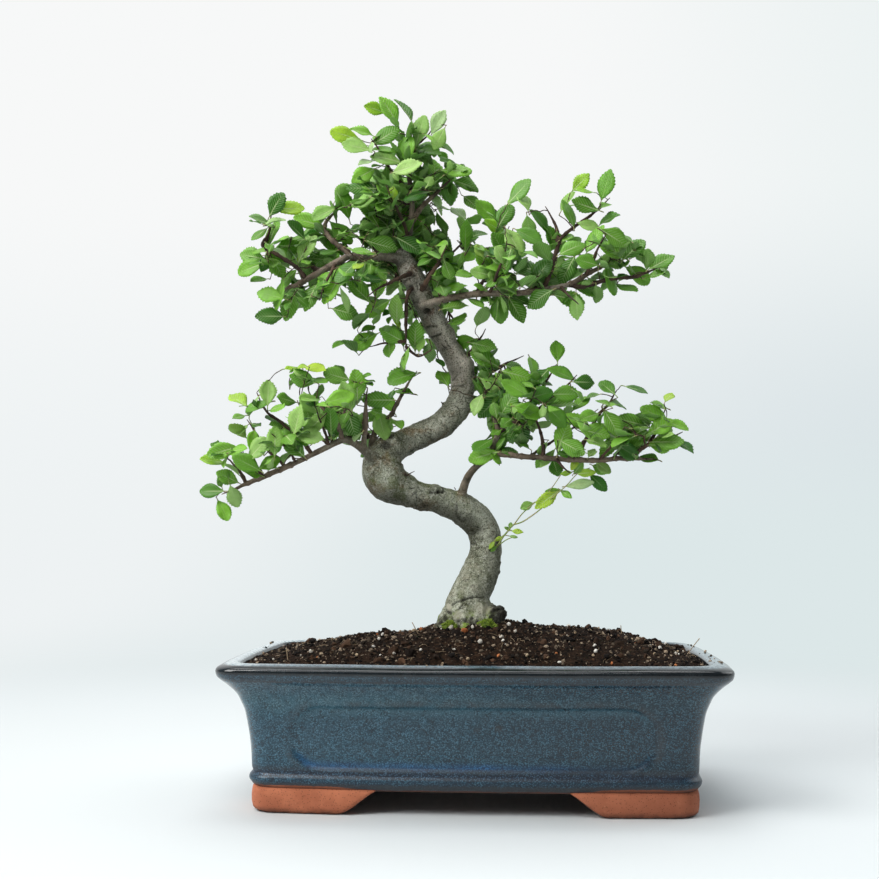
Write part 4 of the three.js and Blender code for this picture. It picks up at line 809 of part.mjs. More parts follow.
// A lathe whose rings follow the pot's plan. Each row is [inset, z, scale]; the first and last rows close on the axis.
function loft(rows, height = (x, y, z) => z) {
  const seg = PLAN.length, g = new THREE.LatheGeometry(rows.map((r, j) => new THREE.Vector2(r[2] === 0 ? 0 : 10 + j, r[1])), seg);
  const pos = g.attributes.position, rings = rows.map((r) => outline(r[0]).map(([x, y]) => [x * (r[2] ?? 1), y * (r[2] ?? 1)]));
  for (let i = 0; i <= seg; i++)
    rows.forEach((r, j) => {
      const [x, y] = rings[j][i % seg];
      pos.setXYZ(i * rows.length + j, x, y, height(x, y, r[1], r));
    });
  return solid(g);
}

// A tapering limb: a capped cylinder bent along a curve through the points, its radius read from them.
const V = (p) => new THREE.Vector3(p[0], p[1], p[2]);
function limb(points, sides, steps, grow = 0, shape = () => 1) {
  const P = points.map((p) => V(p));
  const curve = P.length > 2 ? new THREE.CatmullRomCurve3(P, false, "centripetal") : new THREE.LineCurve3(P[0], P[1]);
  const along = [0];
  for (let i = 1; i < P.length; i++) along.push(along[i - 1] + P[i].distanceTo(P[i - 1]));
  const radii = points.map((p, i) => [along[i] / along[along.length - 1], p[3] + grow]);
  const frames = curve.computeFrenetFrames(steps, false), g = new THREE.CylinderGeometry(1, 1, 1, sides, steps), pos = g.attributes.position;
  const centres = [...Array(steps + 1).keys()].map((i) => curve.getPointAt(i / steps));
  const v = new THREE.Vector3();
  for (let i = 0; i < pos.count; i++) {
    const k = Math.round((pos.getY(i) + 0.5) * steps), t = k / steps, x = pos.getX(i), z = pos.getZ(i);
    const r = table(radii, t) * shape(t, Math.atan2(z, x));
    v.copy(centres[k]).addScaledVector(frames.normals[k], x * r).addScaledVector(frames.binormals[k], z * r);
    pos.setXYZ(i, v.x, v.y, v.z);
  }
  return solid(g);
}
function stick(a, b, r, sides = 3) {
  const d = b.clone().sub(a), g = new THREE.CylinderGeometry(r * 0.8, r, d.length(), sides);
  g.applyQuaternion(new THREE.Quaternion().setFromUnitVectors(new THREE.Vector3(0, 1, 0), d.clone().normalize()));
  g.translate(...a.clone().add(b).multiplyScalar(0.5).toArray());
  return solid(g);
}
// A leaf with its stalk: a capped cylinder of four sides, flattened into a blade that is thickest on the midrib.
// The stalk starts at `from`, the blade runs along the row's midrib; a small cap closes the tip.
function leaf(row, from, grow = 0) {
  const [x, y, z, dx, dy, dz, nx, ny, nz, L, W] = row;
  const d = new THREE.Vector3(dx, dy, dz).normalize(), n = new THREE.Vector3(nx, ny, nz), s = new THREE.Vector3().crossVectors(n, d).normalize();
  n.crossVectors(d, s).normalize();
  const base = new THREE.Vector3(x, y, z), at = (t) => base.clone().addScaledVector(d, L * t);
  const rings = [[from, TWIG_R, TWIG_R], [at(0.04), 0.09 * W, LEAF_THICK * 0.42], [at(0.5), W / 2, LEAF_THICK / 2], [at(1), 0.03 * W, LEAF_THICK * 0.2]];
  const k = base.clone().sub(from).normalize(), s0 = s.clone().addScaledVector(k, -k.dot(s)).normalize(), n0 = new THREE.Vector3().crossVectors(k, s0);
  const g = new THREE.CylinderGeometry(1, 1, 1, 4, 3), pos = g.attributes.position;
  for (let i = 0; i < pos.count; i++) {
    const j = Math.round((pos.getY(i) + 0.5) * 3), [c, w, h] = rings[j];
    const p = c.clone().addScaledVector(j ? s : s0, pos.getX(i) * (w + grow)).addScaledVector(j ? n : n0, pos.getZ(i) * (h + grow));
    pos.setXYZ(i, p.x, p.y, p.z);
  }
  return solid(g);
}

const group = new THREE.Group();
function add(name, m, material) {
  const mesh = new THREE.Mesh(geometryOf(m), material.clone());
  mesh.name = name;
  group.add(mesh);
  return m;
}
const touches = (a, b) => {
  const p = a.boundingBox(), q = b.boundingBox();
  for (let k = 0; k < 3; k++) if (p.max[k] < q.min[k] || q.max[k] < p.min[k]) return false;
  return a.intersect(b).volume() > 0;
};

// ---- pot ----------------------------------------------------------------
const ring = (rows) => rows.map(([i, z]) => [i, z, 1]);
let pot = loft([[33, FLOOR_TOP, 0], ...ring(POT_IN), ...ring(POT_OUT), ...ring(POT_FOOT), [35, FLOOR_UNDER, 0]]);
const flare = POT_OUT.slice(3, 15);
{
  // Sunk panel: a long rounded window, cut as deep everywhere as the wall is curved.
  const { halfLength: l, halfHeight: h, z, depth } = PANEL, s = new THREE.Shape();
  s.moveTo(-l + h, -h); s.lineTo(l - h, -h); s.absarc(l - h, 0, h, -Math.PI / 2, Math.PI / 2); s.lineTo(-l + h, h); s.absarc(-l + h, 0, h, Math.PI / 2, 1.5 * Math.PI);
  const window = new THREE.ExtrudeGeometry(s, { depth: 2 * POT_D, bevelEnabled: false, curveSegments: 7 });
  window.rotateX(Math.PI / 2); window.translate(0, POT_D, z);
  const core = loft([[flare[0][0] + depth, flare[0][1], 0], ...flare.map(([i, zz]) => [i + depth, zz, 1]), [flare[11][0] + depth, flare[11][1], 0]]);
  pot = pot.subtract(solid(window).subtract(core));
}
function gapPrism([low, high], along) {
  const s = new THREE.Shape([[-low, -1], [low, -1], [low, 0], [lerp(low, high, 0.55), 7.4], [lerp(low, high, 0.78), 11.4], [high, FLOOR_UNDER], [-high, FLOOR_UNDER],
    [-lerp(low, high, 0.78), 11.4], [-lerp(low, high, 0.55), 7.4], [-low, 0]].map(([x, z]) => new THREE.Vector2(x, z)));
  const g = new THREE.ExtrudeGeometry(s, { depth: 400, bevelEnabled: false });
  g.rotateX(Math.PI / 2); g.translate(0, 200, 0);
  if (along === "x") g.rotateZ(Math.PI / 2);
  return solid(g);
}
pot = pot.subtract(gapPrism(FRONT_GAP, "y")).subtract(gapPrism(SIDE_GAP, "x"));
for (const x of [-DRAIN_X, DRAIN_X]) {
  const g = new THREE.CylinderGeometry(DRAIN_R, DRAIN_R, 20, 20);
  g.rotateX(Math.PI / 2); g.translate(x, 0, 17);
  pot = pot.subtract(solid(g));
}
add("pot", pot, potMat);

// ---- drainage meshes ----------------------------------------------------
function net(x) {
  const n = 4, pitch = MESH_SIZE / (n + 0.35), w = pitch * 0.68;
  let plate = solid(new THREE.BoxGeometry(MESH_SIZE, MESH_SIZE, MESH_THICK).translate(x, 0, FLOOR_TOP + GAP + MESH_THICK / 2));
  for (let i = 0; i < n; i++) for (let j = 0; j < n; j++)
    plate = plate.subtract(solid(new THREE.BoxGeometry(w, w, 9).translate(x + (i - (n - 1) / 2) * pitch, (j - (n - 1) / 2) * pitch, FLOOR_TOP)));
  return plate;
}
add("drain_mesh_left", net(-DRAIN_X), netMat);
add("drain_mesh_right", net(DRAIN_X), netMat);

// ---- wood ---------------------------------------------------------------
const flutes = (t, a) => 1 + 0.07 * Math.max(0, 1 - t * 9) * Math.cos(4 * a + 0.6) + 0.025 * Math.sin(2 * a + 21 * t) + 0.02 * Math.sin(3 * a - 34 * t);
let wood = limb(TRUNK, 12, 40, 0, flutes);
const span = (p) => p.reduce((s, q, i) => (i ? s + V(q).distanceTo(V(p[i - 1])) : 0), 0);
const parts = [wood, ...ROOTS.map((r) => limb(r, 6, 3))];
for (const p of Object.values(LIMBS)) {
  const thick = Math.max(...p.map((q) => q[3]));
  parts.push(limb(p, thick > 3 ? 6 : 4, Math.max(2, Math.min(8, Math.round(span(p) / 18)))));
}
wood = wasm.Manifold.union(parts);
add("trunk", wood, barkMat);

// ---- soil ---------------------------------------------------------------
const soilTop = (x, y) => {
  const ridge = table(RIDGE, x), f = Math.max(0, 1 - (Math.abs(y) / 84) ** 2.1);
  return SOIL_EDGE_Z + (ridge - SOIL_EDGE_Z) * f + 0.5 * Math.sin(x * 0.31 + y * 0.17) * f;
};
const soilLoft = (up) => loft([[33 + GAP, FLOOR_TOP + GAP, 0], ...POT_IN.map(([i, z]) => [i + GAP + 0.15, Math.max(z, FLOOR_TOP + GAP), 1]).slice(0, -1),
  [13.4, SOIL_EDGE_Z - 0.4, 1], [16.5, 1, 1, 1], [24, 1, 1, 1], [34, 1, 1, 1], [46, 1, 1, 1], [58, 1, 1, 1], [70, 1, 1, 1], [82, 1, 1, 1], [86, 1, 0, 1]],
  (x, y, z, r) => (r[3] ? soilTop(x, y) + up : z));
const foot = (grow) => wasm.Manifold.union([limb(TRUNK.slice(0, 8).map((p, i) => (i ? p : [p[0], p[1], p[2] - grow, p[3]])), 12, 10, grow + 1.4), ...ROOTS.map((r) => limb(r.map((p, i) => (i === 2 ? [p[0] * 1.02, p[1] * 1.02, p[2] - 0.3, p[3]] : p)), 6, 3, grow))]);
const socket = foot(GAP + 0.1);
let soil = soilLoft(0).subtract(socket);
for (const x of [-DRAIN_X, DRAIN_X]) {
  const g = new THREE.BoxGeometry(MESH_SIZE + 1, MESH_SIZE + 1, 2 * (MESH_THICK + 2 * GAP));
  g.translate(x, 0, FLOOR_TOP);
  soil = soil.subtract(solid(g));
}
soil = soil.decompose().sort((a, b) => b.volume() - a.volume())[0];
add("soil", soil, soilMat);

// ---- moss ---------------------------------------------------------------
const lifted = soilLoft(GAP + 0.05).add(socket);
for (const [name, c, r] of MOSS) {
  const g = new THREE.SphereGeometry(1, 10, 6);
  g.rotateX(Math.PI / 2); g.scale(...r); g.translate(...c);
  add(name, solid(g).subtract(lifted).decompose().sort((a, b) => b.volume() - a.volume())[0], mossMat);
}

// ---- shoots -------------------------------------------------------------
const placed = [];
const clear = (m) => !touches(m, wood) && !placed.some((q) => touches(m, q));
for (const [name, at, tip, leaves] of SHOOTS) {
  const a = V(at), u = V(tip).sub(a);
  const reach = Math.max(12, u.length());
  u.normalize();
  let stem = null, p, q;
  for (let k = 0; k < 30 && !stem; k++) {
    p = a.clone().addScaledVector(u, at[3] * 0.6 + 0.3 + 0.3 * k);
    q = a.clone().addScaledVector(u, Math.max(reach, at[3] + 9 + 0.3 * k));
    const grown = stick(p.clone().addScaledVector(u, -0.2), q, TWIG_R * 1.6 + 0.2, 4);
    if (clear(grown)) stem = stick(p, q, TWIG_R * 1.6, 4);
  }
  if (!stem) throw new Error(name + " has no way out of the wood");
  const bits = [stem];
  let n = 0;
  for (const row of leaves) {
    if (n >= LEAVES_PER_SHOOT) break;
    const base = V(row);
    // The stalk leaves the stem where it reaches the blade most directly.
    let from = null, least = Infinity;
    for (const t of [0.3, 0.45, 0.6, 0.8, 0.97]) {
      const f = p.clone().lerp(q, t), l = f.distanceTo(base), along = base.clone().sub(f).dot(V(row.slice(3))) / l;
      if (l > 1.5 && along > 0.12 && l * (1.5 - along) < least) { least = l * (1.5 - along); from = f; }
    }
    if (!from) continue;
    if (!clear(leaf(row, from, 0.2))) continue;
    bits.push(leaf(row, from));
    n++;
  }
  const m = wasm.Manifold.union(bits);
  if (m.decompose().length !== 1) throw new Error(name + " is not one body");
  placed.push(m);
  add(name, m, leafMat);
}

// ---- origin: under the middle of the whole object, on the ground ---------
const box = new THREE.Box3().setFromObject(group);
const root = new THREE.Group();
group.position.set(-(box.min.x + box.max.x) / 2, -(box.min.y + box.max.y) / 2, 0);
root.add(group);

export default root;
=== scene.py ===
"""Chinese elm bonsai in a glazed tray pot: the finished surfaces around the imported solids.
Metres, +Z up, the pot's long side along X, the front towards -Y. Tables are in millimetres from the pot's centre."""

import math

import bmesh
import bpy
import numpy as np
from mathutils import Matrix, Vector
from mathutils.geometry import tessellate_polygon


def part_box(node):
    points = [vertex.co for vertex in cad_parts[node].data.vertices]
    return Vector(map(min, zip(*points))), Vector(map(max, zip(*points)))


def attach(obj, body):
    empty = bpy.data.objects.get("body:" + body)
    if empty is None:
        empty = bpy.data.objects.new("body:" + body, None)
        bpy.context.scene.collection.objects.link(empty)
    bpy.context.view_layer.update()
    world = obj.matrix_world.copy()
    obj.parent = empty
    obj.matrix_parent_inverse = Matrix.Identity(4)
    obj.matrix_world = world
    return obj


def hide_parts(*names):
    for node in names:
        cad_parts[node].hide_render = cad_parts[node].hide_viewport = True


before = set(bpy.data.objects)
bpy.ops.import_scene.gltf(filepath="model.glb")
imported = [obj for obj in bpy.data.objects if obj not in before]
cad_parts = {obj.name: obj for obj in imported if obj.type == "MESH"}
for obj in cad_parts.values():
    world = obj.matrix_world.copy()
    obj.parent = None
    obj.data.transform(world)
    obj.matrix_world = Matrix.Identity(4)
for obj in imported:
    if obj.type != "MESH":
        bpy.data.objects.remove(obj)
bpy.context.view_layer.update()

MM = 0.001
_lo, _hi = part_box("pot")
SHIFT = np.array([(_lo.x + _hi.x) / 2, (_lo.y + _hi.y) / 2, 0.0])  # the pot's centre in the frame
rng = np.random.default_rng(20)


# ---- mesh helpers --------------------------------------------------------
def build(name, verts, faces, mats, face_mat=None, smooth=True, uv=None, attrs=None, body="root", slot=None, replaces=(), sharp=None, recalc=False):
    """A mesh piece from millimetre vertices and arrays of triangles and quads."""
    me = bpy.data.meshes.new(name)
    v = (np.asarray(verts, float) * MM + SHIFT).astype(np.float32)
    faces = [np.asarray(f, np.int32) for f in faces if len(f)]
    loops = np.concatenate([f.ravel() for f in faces])
    totals = np.concatenate([np.full(len(f), f.shape[1], np.int32) for f in faces])
    starts = np.concatenate([[0], np.cumsum(totals)[:-1]]).astype(np.int32)
    me.vertices.add(len(v))
    me.vertices.foreach_set("co", v.ravel())
    me.loops.add(len(loops))
    me.loops.foreach_set("vertex_index", loops)
    me.polygons.add(len(totals))
    me.polygons.foreach_set("loop_start", starts)
    for m in mats:
        me.materials.append(m)
    if face_mat is not None:
        me.polygons.foreach_set("material_index", np.asarray(face_mat, np.int32))
    me.update(calc_edges=True)
    me.polygons.foreach_set("use_smooth", np.full(len(totals), smooth, bool))
    if uv is not None:
        layer = me.uv_layers.new(name="leaf_uv")
        layer.data.foreach_set("uv", np.asarray(uv, np.float32)[loops].ravel())
    for key, values in (attrs or {}).items():
        a = me.attributes.new(key, "FLOAT", "POINT")
        a.data.foreach_set("value", np.asarray(values, np.float32))
    if recalc:
        bm = bmesh.new()
        bm.from_mesh(me)
        bmesh.ops.recalc_face_normals(bm, faces=bm.faces)
        bm.to_mesh(me)
        bm.free()
    if sharp:
        me.set_sharp_from_angle(angle=math.radians(sharp))
    me.validate()
    ob = bpy.data.objects.new(name, me)
    bpy.context.scene.collection.objects.link(ob)
    if body:
        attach(ob, body)
    if replaces:
        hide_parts(*replaces)
    return ob


def _hash(x, y, z, seed):
    h = (x * 73856093) ^ (y * 19349663) ^ (z * 83492791) ^ np.int64(seed * 7919 + 101)
    h = ((h ^ (h >> 13)) * 1274126177) & 0x7FFFFFFFFFFF
    h = ((h ^ (h >> 15)) * 2246822519) & 0x7FFFFFFFFFFF
    return ((h >> 9) & 0xFFFFF) / 524287.5 - 1.0


def noise(p, size, seed=0):
    """Smooth value noise from -1 to 1, with features of about that size in millimetres."""
    q = np.asarray(p, float) / size
    i = np.floor(q).astype(np.int64)
    f = q - i
    f = f * f * f * (f * (f * 6 - 15) + 10)
    out = np.zeros(len(q))
    for dx in (0, 1):
        wx = f[:, 0] if dx else 1 - f[:, 0]
        for dy in (0, 1):
            wy = wx * (f[:, 1] if dy else 1 - f[:, 1])
            for dz in (0, 1):
                out += wy * (f[:, 2] if dz else 1 - f[:, 2]) * _hash(i[:, 0] + dx, i[:, 1] + dy, i[:, 2] + dz, seed)
    return out


def fbm(p, size, octaves, seed=0):
    total, amp = 0.0, 1.0
    for k in range(octaves):
        total = total + amp * noise(np.asarray(p) + 13.7 * k, size / 2**k, seed + k)
        amp *= 0.5
    return total


def smooth(e0, e1, x):
    t = np.clip((np.asarray(x, float) - e0) / (e1 - e0), 0, 1)
    return t * t * (3 - 2 * t)


def curve_through(rows, step):
    """Catmull-Rom through the rows (any columns, the first three are the place), sampled about every step."""
    p = np.asarray(rows, float)
    if len(p) == 2:
        n = max(1, int(np.ceil(np.linalg.norm(p[1, :3] - p[0, :3]) / step)))
        t = np.linspace(0, 1, n + 1)[:, None]
        return p[0] * (1 - t) + p[1] * t
    q = np.vstack([2 * p[0] - p[1], p, 2 * p[-1] - p[-2]])
    out = []
    for i in range(1, len(q) - 2):
        n = max(1, int(np.ceil(np.linalg.norm((q[i + 1] - q[i])[:3]) / step)))
        t = (np.arange(n) / n)[:, None]
        a, b, c, d = q[i - 1], q[i], q[i + 1], q[i + 2]
        out.append(0.5 * ((2 * b) + (c - a) * t + (2 * a - 5 * b + 4 * c - d) * t**2 + (3 * b - a - 3 * c + d) * t**3))
    out.append(q[-2][None])
    return np.vstack(out)


def frames_along(c):
    """Tangents and two side vectors that don't twist along the polyline c."""
    t = np.gradient(c, axis=0)
    t /= np.linalg.norm(t, axis=1)[:, None] + 1e-12
    u = np.zeros_like(c)
    a = np.array([0.0, 0.0, 1.0]) if abs(t[0, 2]) < 0.9 else np.array([1.0, 0.0, 0.0])
    prev = a - t[0] * (a @ t[0])
    for k in range(len(c)):
        prev = prev - t[k] * (prev @ t[k])
        prev = prev / (np.linalg.norm(prev) + 1e-12)
        u[k] = prev
    return t, u, np.cross(t, u)


def tube(c, r, sides, base=0, tip=0.35):
    """A closed tube round the polyline c with radii r: vertices, quads, triangles. Both ends are domed."""
    c, r = np.asarray(c, float), np.asarray(r, float)
    t, u, w = frames_along(c)
    a = np.arange(sides) / sides * 2 * np.pi
    ring = np.cos(a)[None, :, None] * u[:, None, :] + np.sin(a)[None, :, None] * w[:, None, :]
    v = (c[:, None, :] + ring * r[:, None, None]).reshape(-1, 3)
    n = len(c)
    v = np.vstack([v, c[0] - t[0] * r[0] * 0.3, c[-1] + t[-1] * r[-1] * (0.5 + tip)])
    i = np.arange(n - 1)[:, None] * sides
    j = np.arange(sides)[None, :]
    k = (j + 1) % sides
    quads = np.stack([i + j, i + k, i + sides + k, i + sides + j], -1).reshape(-1, 4)
    j = np.arange(sides)
    k = (j + 1) % sides
    tris = np.vstack([np.stack([np.full(sides, n * sides), k, j], -1), np.stack([np.full(sides, n * sides + 1), (n - 1) * sides + j, (n - 1) * sides + k], -1)])
    return v, quads + base, tris + base


class Pile:
    """Collects vertices and faces of many closed bodies into one piece."""

    def __init__(self):
        self.v, self.q, self.t, self.n, self.qm, self.tm, self.uv, self.at = [], [], [], 0, [], [], [], {}

    def add(self, v, quads=None, tris=None, mat=0, uv=None, **attrs):
        v = np.asarray(v, float)
        if quads is not None and len(quads):
            self.q.append(np.asarray(quads) + self.n)
            self.qm.append(np.full(len(quads), mat))
        if tris is not None and len(tris):
            self.t.append(np.asarray(tris) + self.n)
            self.tm.append(np.full(len(tris), mat))
        self.v.append(v)
        self.uv.append(np.zeros((len(v), 2)) if uv is None else uv)
        for key, value in attrs.items():
            self.at.setdefault(key, []).append(np.broadcast_to(np.asarray(value, float), (len(v),)))
        self.n += len(v)

    def make(self, name, mats, use_uv=False, **kw):
        faces = [np.vstack(x) for x in (self.q, self.t) if x]
        fm = np.concatenate(self.qm + self.tm)
        attrs = {k: np.concatenate(x) for k, x in self.at.items()}
        return build(name, np.vstack(self.v), faces, mats, face_mat=fm, uv=np.vstack(self.uv) if use_uv else None, attrs=attrs, **kw)


# ---- material helpers ----------------------------------------------------
class Nodes:
    """A short way to write a node material."""

    def __init__(self, name):
        self.mat = bpy.data.materials.new(name)
        self.mat.use_nodes = True
        self.tree = self.mat.node_tree
        self.tree.nodes.clear()
        self.out = self.tree.nodes.new("ShaderNodeOutputMaterial")

    def node(self, kind, **props):
        n = self.tree.nodes.new("ShaderNode" + kind)
        for k, v in props.items():
            setattr(n, k, v)
        return n

    def put(self, socket, value):
        if isinstance(value, bpy.types.NodeSocket):
            self.tree.links.new(value, socket)
        elif value is not None:
            if socket.type == "RGBA" and not hasattr(value, "__len__"):
                value = (value, value, value, 1)
            if socket.type == "RGBA" and len(value) == 3:
                value = (*value, 1)
            socket.default_value = value

    def math(self, op, a, b=None, c=None, clamp=False):
        n = self.node("Math", operation=op, use_clamp=clamp)
        for s, v in zip(n.inputs, (a, b, c)):
            self.put(s, v)
        return n.outputs[0]

    def ramp(self, x, e0, e1, to0=0.0, to1=1.0, kind="SMOOTHSTEP"):
        n = self.node("MapRange", interpolation_type=kind)
        for s, v in zip(n.inputs[:5], (x, e0, e1, to0, to1)):
            self.put(s, v)
        return n.outputs[0]

    def mix(self, f, a, b, kind="MIX"):
        n = self.node("Mix", data_type="RGBA", blend_type=kind)
        self.put(n.inputs[0], f)
        self.put(n.inputs[6], a)
        self.put(n.inputs[7], b)
        return n.outputs[2]

    def noise(self, vec, scale, detail=2.0, rough=0.5, distortion=0.0):
        n = self.node("TexNoise", noise_dimensions="3D")
        self.put(n.inputs["Vector"], vec)
        self.put(n.inputs["Scale"], scale)
        self.put(n.inputs["Detail"], detail)
        self.put(n.inputs["Roughness"], rough)
        self.put(n.inputs["Distortion"], distortion)
        return n.outputs["Fac"]

    def cells(self, vec, scale, feature="F1", out="Distance", randomness=1.0):
        n = self.node("TexVoronoi", feature=feature)
        self.put(n.inputs["Vector"], vec)
        self.put(n.inputs["Scale"], scale)
        self.put(n.inputs["Randomness"], randomness)
        return n.outputs[out]

    def cells2(self, vec, scale):
        """Distance from the nearest cell's centre, and that cell's own random number."""
        n = self.node("TexVoronoi", feature="F1")
        self.put(n.inputs["Vector"], vec)
        self.put(n.inputs["Scale"], scale)
        sep = self.node("SeparateColor")
        self.put(sep.inputs[0], n.outputs["Color"])
        return n.outputs["Distance"], sep.outputs[0]

    def coords(self, scale=None):
        c = self.node("TexCoord").outputs["Object"]
        if scale is None:
            return c
        n = self.node("Mapping", vector_type="POINT")
        self.put(n.inputs["Vector"], c)
        self.put(n.inputs["Scale"], scale)
        return n.outputs[0]

    def xyz(self, vec):
        return self.node("SeparateXYZ") if vec is None else self._xyz(vec)

    def _xyz(self, vec):
        n = self.node("SeparateXYZ")
        self.put(n.inputs[0], vec)
        return n.outputs

    def attr(self, name, out="Fac"):
        return self.node("Attribute", attribute_name=name).outputs[out]

    def bump(self, height, strength, distance, normal=None):
        n = self.node("Bump")
        self.put(n.inputs["Height"], height)
        self.put(n.inputs["Strength"], strength)
        self.put(n.inputs["Distance"], distance)
        if normal is not None:
            self.put(n.inputs["Normal"], normal)
        return n.outputs[0]

    def principled(self, color, rough, normal=None, **kw):
        n = self.node("BsdfPrincipled")
        self.put(n.inputs["Base Color"], color)
        self.put(n.inputs["Roughness"], rough)
        if normal is not None:
            self.put(n.inputs["Normal"], normal)
        for k, v in kw.items():
            self.put(n.inputs[k.replace("_", " ")], v)
        return n.outputs[0]

    def done(self, shader):
        self.tree.links.new(shader, self.out.inputs["Surface"])
        return self.mat


def rgb(r, g, b):
    """A colour named by its screen values, 0 to 255, as linear light."""
    return tuple((c / 255 / 12.92) if c / 255 <= 0.04045 else ((c / 255 + 0.055) / 1.055) ** 2.4 for c in (r, g, b)) + (1.0,)


